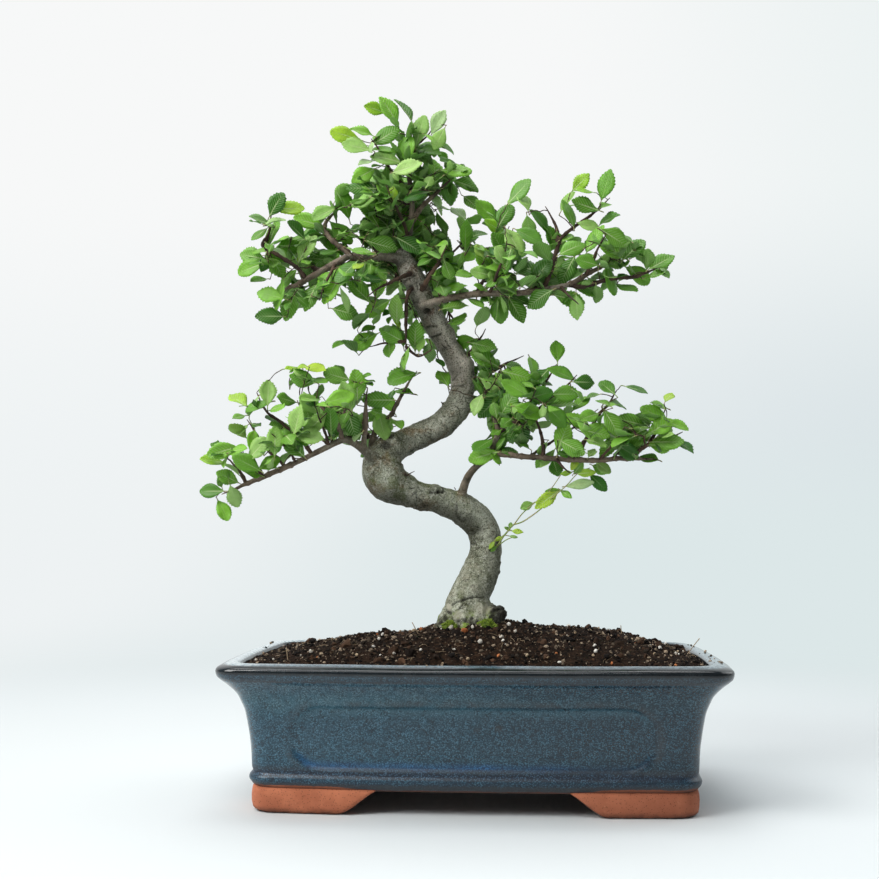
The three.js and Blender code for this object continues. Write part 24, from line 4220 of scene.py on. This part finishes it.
    # painted shade for the bark: wood facing down or to the right, kept in the 'under' attribute
    under = np.maximum(smooth(0.15, -0.75, no[:, 2]), 0.70 * smooth(0.20, 0.95, no[:, 0])) * smooth(1.5, 4.0, near_r)
    p = p + no * relief[:, None]
    tris = quads = None
    loops = np.empty(len(me.loops), np.int32)
    me.loops.foreach_get("vertex_index", loops)
    totals = np.empty(len(me.polygons), np.int32)
    me.polygons.foreach_get("loop_total", totals)
    starts = np.concatenate([[0], np.cumsum(totals)[:-1]])
    q4 = starts[totals == 4]
    q3 = starts[totals == 3]
    faces = []
    if len(q4):
        faces.append(loops[q4[:, None] + np.arange(4)])
    if len(q3):
        faces.append(loops[q3[:, None] + np.arange(3)])
    bpy.data.meshes.remove(me)
    build("elm_trunk", p, faces, [BARK], slot="bark", replaces=("trunk",), attrs={"scar": scar, "pale": pale, "under": under, "slim": smooth(4.6, 2.3, near_r) * smooth(150, 165, p[:, 2])})
    for line, r0 in SPURS:
        if line[0][2] < 124:
            continue
        c = curve_through(np.array(line, float), 0.9)
        v, q, t = tube(c, np.linspace(r0, r0 * 0.35, len(c)), 6)
        thin.add(v, q, t, mat=1)
    for rows in SPROUT:
        c = curve_through(np.array(rows, float), 1.4)
        v, q, t = tube(c[:, :3], c[:, 3], 6)
        thin.add(v, q, t, mat=2)
    thin.make("elm_limbs", [LIMB, TWIG, STEM], slot="bark")
    return n


def hash_name(s):
    h = 7
    for ch in s:
        h = (h * 31 + ord(ch)) % 100003
    return h


def local_radius(p):
    """Radius of the nearest limb at each point."""
    best = np.full(len(p), 1e9)
    rad = np.zeros(len(p))
    for name, rows in LIMBS:
        c = curve_through(rows, 4.0)
        c = c[c[:, 3] > 1.2]
        if not len(c):
            continue
        lo, hi = c[:, :3].min(0) - 14, c[:, :3].max(0) + 14
        sel = np.where(((p > lo) & (p < hi)).all(1))[0]
        for k in range(len(c)):
            d = ((p[sel] - c[k, :3]) ** 2).sum(1) - c[k, 3] ** 2
            up = d < best[sel]
            best[sel[up]] = d[up]
            rad[sel[up]] = c[k, 3]
    return rad


WOOD_VERTS = wood()


def twigs():
    """Fine woody twigs, knuckled at each leaf scar."""
    pile = Pile()
    for rows in TWIGS:
        a = np.array(rows, float)
        c = curve_through(a, 2.2)
        r = np.maximum(c[:, 3] * 0.88, 0.22)
        s = np.arange(len(c))
        r = r * (1 + 0.22 * ((s % 3) == 1))
        cc = c[:, :3] + (0.22 * np.column_stack([noise(c[:, :3], 3, 171), noise(c[:, :3], 3, 172), noise(c[:, :3], 3, 173)])) * smooth(0, 4, s)[:, None]
        v, q, t = tube(cc, r, 4)
        pile.add(v, q, t)
    pile.make("elm_twigs", [TWIG], slot="bark")


twigs()


# ---- leaves --------------------------------------------------------------
def leaf_mesh(row, r, stations, wide):
    """One leaf as a thin closed solid: toothed blade folded along its midrib, with the stalk. Columns: stalk foot, base, midrib, face normal, length, width, age."""
    ax, ay, az, bx, by, bz, dx, dy, dz, nx, ny, nz, L, W, age = row
    b, d, nrm = np.array([bx, by, bz]), np.array([dx, dy, dz]), np.array([nx, ny, nz])
    d = d / np.linalg.norm(d)
    s = np.cross(nrm, d)
    s /= np.linalg.norm(s)
    nrm = np.cross(d, s)
    t = np.linspace(0, 1, stations)
    t = t**0.92
    full = r.uniform(1.02, 1.32)
    blunt = r.uniform(0.50, 0.95)
    if wide and L > 15.5 and W > 9.0:
        L, W = L * 0.96, W * 0.93
    w = W * 1.13 / 2 * np.clip(np.sin(np.pi * np.clip(t, 0, 1) ** full), 0, 1) ** (1.0 + (blunt - 1.0) * t)
    w[0], w[-1] = 0.28, 0.22
    odd = np.arange(stations) % 2 == 1
    teeth = r.uniform(0.008, 0.034) * W
    tooth = np.where(odd, 1.0, -1.0) * teeth * smooth(0.10, 0.30, t) * smooth(1.0, 0.88, t) * (1 + 0.5 * r.normal(size=stations))
    skew = r.uniform(-0.09, 0.09)
    fold = r.uniform(0.04, 0.40)
    bend = r.uniform(-0.08, 0.28)
    cup = r.uniform(-0.012, 0.022)
    wave_a, wave_p, wave_k = r.uniform(0.05, 0.70), r.uniform(0, 6.3), r.uniform(1.5, 3.4)
    twist = r.uniform(-0.20, 0.20)
    cols = (-1.0, -0.55, 0.0, 0.55, 1.0) if wide else (-1.0, 0.0, 1.0)
    m = len(cols)
    grid = np.empty((stations, m, 3))
    uv = np.empty((stations, m, 2))
    for j, c in enumerate(cols):
        ww = w * (1 + skew * np.sign(c) * smooth(0.6, 0.0, t))
        lat = c * ww + (np.sign(c) * tooth if abs(c) == 1.0 else 0)
        along = t * L + (np.where(odd, 0.25, -0.1) if abs(c) == 1.0 else 0) * (L / stations)
        quilt = 0.10 * np.sin((t - 0.45 * abs(c) * ww / L) * 2 * np.pi * 10) * (abs(c) == 0.55)
        h = fold * np.abs(lat) - cup * lat**2 - bend * L * (t - 0.15) ** 2 + twist * lat * t + wave_a * np.sin(t * 2 * np.pi * wave_k / 2 + wave_p + c) * abs(c) * smooth(0, 0.2, t) + quilt
        grid[:, j] = b + d * along[:, None] + s * lat[:, None] + nrm * h[:, None]
        uv[:, j, 0] = t
        uv[:, j, 1] = 0.5 + lat / L
    th = 0.11
    thick = np.array((0.15, 1, 1.1, 1, 0.15) if wide else (0.15, 1.1, 0.15))
    keel = np.array((0.15, 1, 2.6, 1, 0.15) if wide else (0.15, 2.4, 0.15))
    up = (grid + nrm * th * thick[None, :, None]).reshape(-1, 3)
    dn = (grid - nrm * th * keel[None, :, None]).reshape(-1, 3)
    n = stations * m
    i = (np.arange(stations - 1) * m)[:, None]
    j = np.arange(m - 1)[None, :]
    top = np.stack([i + j, i + m + j, i + m + 1 + j, i + 1 + j], -1).reshape(-1, 4)
    low = np.stack([i + j, i + 1 + j, i + m + 1 + j, i + m + j], -1).reshape(-1, 4) + n
    e = (np.arange(stations - 1) * m)
    g = e + m - 1
    rim = np.vstack([np.stack([e, e + n, e + m + n, e + m], -1), np.stack([g, g + m, g + m + n, g + n], -1)])
    jj = np.arange(m - 1)
    k = (stations - 1) * m
    ends = np.vstack([np.stack([jj, jj + 1, jj + 1 + n, jj + n], -1), np.stack([k + jj, k + jj + n, k + jj + 1 + n, k + jj + 1], -1)])
    quads = np.vstack([top, low, rim, ends])
    v = np.vstack([up, dn])
    uvs = np.vstack([uv.reshape(-1, 2)] * 2)
    side = np.concatenate([np.ones(n), np.zeros(n)])
    a = np.array([ax, ay, az])
    m1 = a + (b - a) * 0.5 + np.array([0, 0, 0.25])
    stalk = curve_through(np.vstack([a, m1, b + d * 0.8]), 1.8)
    return v, quads, uvs, side, stalk


def buried():
    """How far inside the crown each leaf sits, 0 to 1: many leaves above it and in front of it."""
    rows = [row for _, part in SHOOTS for row in part]
    a = np.array([[q[3] + q[6] * q[12] / 2, q[4] + q[7] * q[12] / 2, q[5] + q[8] * q[12] / 2] for q in rows], float)
    size = np.array([q[12] * q[13] for q in rows], float)
    out = np.empty(len(a))
    for i in range(len(a)):
        e = a - a[i]
        dist = np.linalg.norm(e, axis=1) + 1e-6
        over = np.clip((e[:, 2] * 0.75 - e[:, 1] * 0.55 - e[:, 0] * 0.25) / dist, 0, 1)
        out[i] = (size * over**1.5 * np.exp(-((dist / 26) ** 2)))[dist > 2].sum() / 100
    lo, hi = np.percentile(out, 25), np.percentile(out, 88)
    return smooth(lo, hi, out)


def leaves():
    deep = buried()
    # painted shade for each leaf, from how far inside the crown it sits
    at = 0
    for name, rows in SHOOTS:
        r = np.random.default_rng(hash_name(name))
        pile = Pile()
        for row in rows:
            vis = row[-1]
            v, q, uv, side, stalk = leaf_mesh(row[:-1], r, (15, 21, 9)[vis], vis == 1)
            # front leaves are painted a little lighter and the others a little darker: painted light on the crown's
            # outside
            tone = float(np.clip(r.normal(0.46, 0.36) + (0.10 if vis == 1 else -0.05), 0, 1))
            age = row[-2]
            if age == 0 and r.random() < (0.13 if vis == 1 else 0.08):
                age = 3
            hue, rib = float(r.random() ** 1.5), float(np.clip(r.normal(0.50, 0.32), 0.05, 1))
            dark = float(deep[at]) * (0.35 if vis == 1 else 1.0)
            at += 1
            pile.add(v, q, None, mat=0, uv=uv, tone=tone, age=age, side=side, hue=hue, rib=rib, deep=dark)
            v, q, t = tube(stalk, np.linspace(0.36, 0.26, len(stalk)), 4 if vis == 1 else 3)
            pile.add(v, q, t, mat=1, tone=tone, age=age, side=1.0, hue=hue, rib=rib, deep=dark)
        pile.make("leaves_" + name[6:], [LEAF, STEM], use_uv=True, slot="leaf", replaces=(name,))


leaves()


# ---- moss ----------------------------------------------------------------
def moss(name, node, centre, radii, count):
    r = np.random.default_rng(hash_name(name))
    pile = Pile()
    v, f = ICO3_V, ICO3_F
    d = 1 + 0.34 * noise(v, 0.5, 12) + 0.16 * noise(v, 0.22, 13)
    pile.add(v * d[:, None] * np.array(radii) * 0.80 + np.array(centre) - (0, 0, 0.6), None, f, tone=0.10)
    for k in range(count):
        a, e = r.uniform(0, 2 * np.pi), math.acos(r.uniform(-0.05, 1.0))
        n = np.array([math.sin(e) * math.cos(a), math.sin(e) * math.sin(a), math.cos(e)])
        bump = 1 + 0.34 * float(noise(n[None], 0.5, 12)[0])
        p = np.array(centre) + n * np.array(radii) * 0.78 * bump - (0, 0, 0.6)
        dirn = n * np.array([1, 1, 1.3]) + r.normal(0, 0.45, 3)
        dirn /= np.linalg.norm(dirn)
        length = r.uniform(0.7, 2.1)
        c = np.vstack([p, p + dirn * length * 0.5, p + dirn * length])
        v, q, t = tube(c, np.array([0.34, 0.26, 0.06]) * r.uniform(0.8, 1.2), 4)
        pile.add(v, q, t, tone=r.random() ** 0.8)
    pile.make(name, [MOSS], slot="moss", replaces=(node,))


moss("moss_tuft_left", "moss_left", (-16, -22.5, 105.6), (5.2, 4.6, 4.2), 330)
moss("moss_tuft_right", "moss_right", (7.5, -22.5, 106.2), (6.6, 4.8, 4.8), 380)


# ---- stage, light, camera ------------------------------------------------
def stage():
    """A pale sweep: floor running up into a bright wall far behind."""
    me = bpy.data.meshes.new("sweep")
    xs = np.linspace(-8, 8, 33)
    prof = [(-5.0, 0.0), (-1.0, 0.0), (0.0, 0.0), (0.8, 0.0), (1.4, 0.0)]
    for k in range(1, 17):
        a = k / 16 * math.pi / 2
        prof.append((1.4 + 2.6 * math.sin(a), 2.6 * (1 - math.cos(a))))
    prof += [(4.0, 6.5)]
    v, f = [], []
    for y, z in prof:
        v += [(float(x), y, z) for x in xs]
    w = len(xs)
    for i in range(len(prof) - 1):
        for j in range(w - 1):
            f.append((i * w + j, i * w + j + 1, (i + 1) * w + j + 1, (i + 1) * w + j))
    me.from_pydata(v, [], f)
    me.polygons.foreach_set("use_smooth", np.ones(len(f), bool))
    m = Nodes("pale_floor")
    c = m.coords()
    x, y, z = m.xyz(c)
    d2 = m.math("ADD", m.math("MULTIPLY", x, x), m.math("MULTIPLY", y, y))
    reach = m.math("SQRT", d2)
    far = m.math("MULTIPLY", m.ramp(reach, 0.30, 1.05), m.ramp(m.math("ADD", y, m.math("MULTIPLY", m.math("ABSOLUTE", x), 0.5)), -0.55, 0.25))
    tint = m.mix(m.ramp(m.noise(c, 0.8, 2), 0.3, 0.7), rgb(213, 219, 221), rgb(217, 222, 224))
    tint = m.mix(m.ramp(reach, 0.19, 0.36), tint, rgb(211, 216, 218))
    tint = m.mix(m.math("MULTIPLY", m.ramp(x, 0.05, -0.45), m.ramp(y, 0.70, 0.0)), tint, rgb(201, 205, 206))
    paint = m.principled(tint, 0.8, None, Specular_IOR_Level=0.1)
    # the far floor and the wall glow by emission: painted light, brightest to the upper left and dimmer to the lower
    # right
    glow = m.mix(m.ramp(x, -1.0, 0.1), rgb(238, 242, 243), rgb(220, 231, 232))
    glow = m.mix(m.ramp(z, 0.10, 0.60), glow, m.mix(m.ramp(x, -0.9, 1.3), rgb(239, 243, 244), rgb(219, 228, 231)))
    glow = m.mix(m.ramp(z, 0.35, 1.60), glow, m.mix(m.ramp(x, 0.0, 1.8), rgb(247, 248, 248), rgb(236, 242, 242)))
    e = m.node("Emission")
    m.put(e.inputs["Color"], glow)
    e.inputs["Strength"].default_value = 1.0
    mx = m.node("MixShader")
    m.tree.links.new(far, mx.inputs[0])
    m.tree.links.new(paint, mx.inputs[1])
    m.tree.links.new(e.outputs[0], mx.inputs[2])
    me.materials.append(m.done(mx.outputs[0]))
    ob = bpy.data.objects.new("sweep", me)
    bpy.context.scene.collection.objects.link(ob)


def area(name, place, aim, size, power, color=(1, 1, 1)):
    d = bpy.data.lights.new(name, "AREA")
    d.shape = "RECTANGLE"
    d.size, d.size_y = size
    d.energy = power
    d.color = color
    ob = bpy.data.objects.new(name, d)
    ob.location = place
    ob.rotation_euler = (Vector(aim) - Vector(place)).to_track_quat("-Z", "Y").to_euler()
    bpy.context.scene.collection.objects.link(ob)
    return ob


stage()
area("key", (-1.15, -0.80, 1.25), (0, 0, 0.16), (1.0, 1.0), 29, (1.0, 0.995, 0.975))
area("strip", (-0.22, -0.95, 1.40), (0, -0.05, 0.09), (1.2, 0.26), 4.2, (1.0, 1.0, 0.99))
area("fill", (1.5, 0.55, 1.15), (0.15, -0.05, 0.05), (1.2, 1.2), 6.5, (0.95, 0.98, 1.0))
area("top", (-0.15, 0.25, 1.9), (0, 0.05, 0.1), (1.5, 1.3), 22, (1.0, 1.0, 1.0))
world = bpy.data.worlds.new("studio")
world.use_nodes = True
world.node_tree.nodes["Background"].inputs[0].default_value = (0.90, 0.95, 0.97, 1)
world.node_tree.nodes["Background"].inputs[1].default_value = 0.17
bpy.context.scene.world = world
bpy.context.scene.view_settings.view_transform = "Standard"

YAW, PITCH = 0.0657, 0.0834
fwd = Vector((-math.sin(YAW) * math.cos(PITCH), math.cos(YAW) * math.cos(PITCH), math.sin(PITCH)))
right = Vector((math.cos(YAW), math.sin(YAW), 0.0))
up = right.cross(fwd)
cam_data = bpy.data.cameras.new("camera")
cam_data.sensor_width = 36.0
cam_data.sensor_fit = "HORIZONTAL"
cam_data.lens = 36.0 * 1195.55 / 879.0
cam_data.clip_end = 50
cam = bpy.data.objects.new("camera", cam_data)
place = Vector((27.60, -781.40, 160.32)) * MM + Vector(SHIFT)
cam.matrix_world = Matrix(((right.x, up.x, -fwd.x, place.x), (right.y, up.y, -fwd.y, place.y), (right.z, up.z, -fwd.z, place.z), (0, 0, 0, 1)))
bpy.context.scene.collection.objects.link(cam)
bpy.context.scene.camera = cam
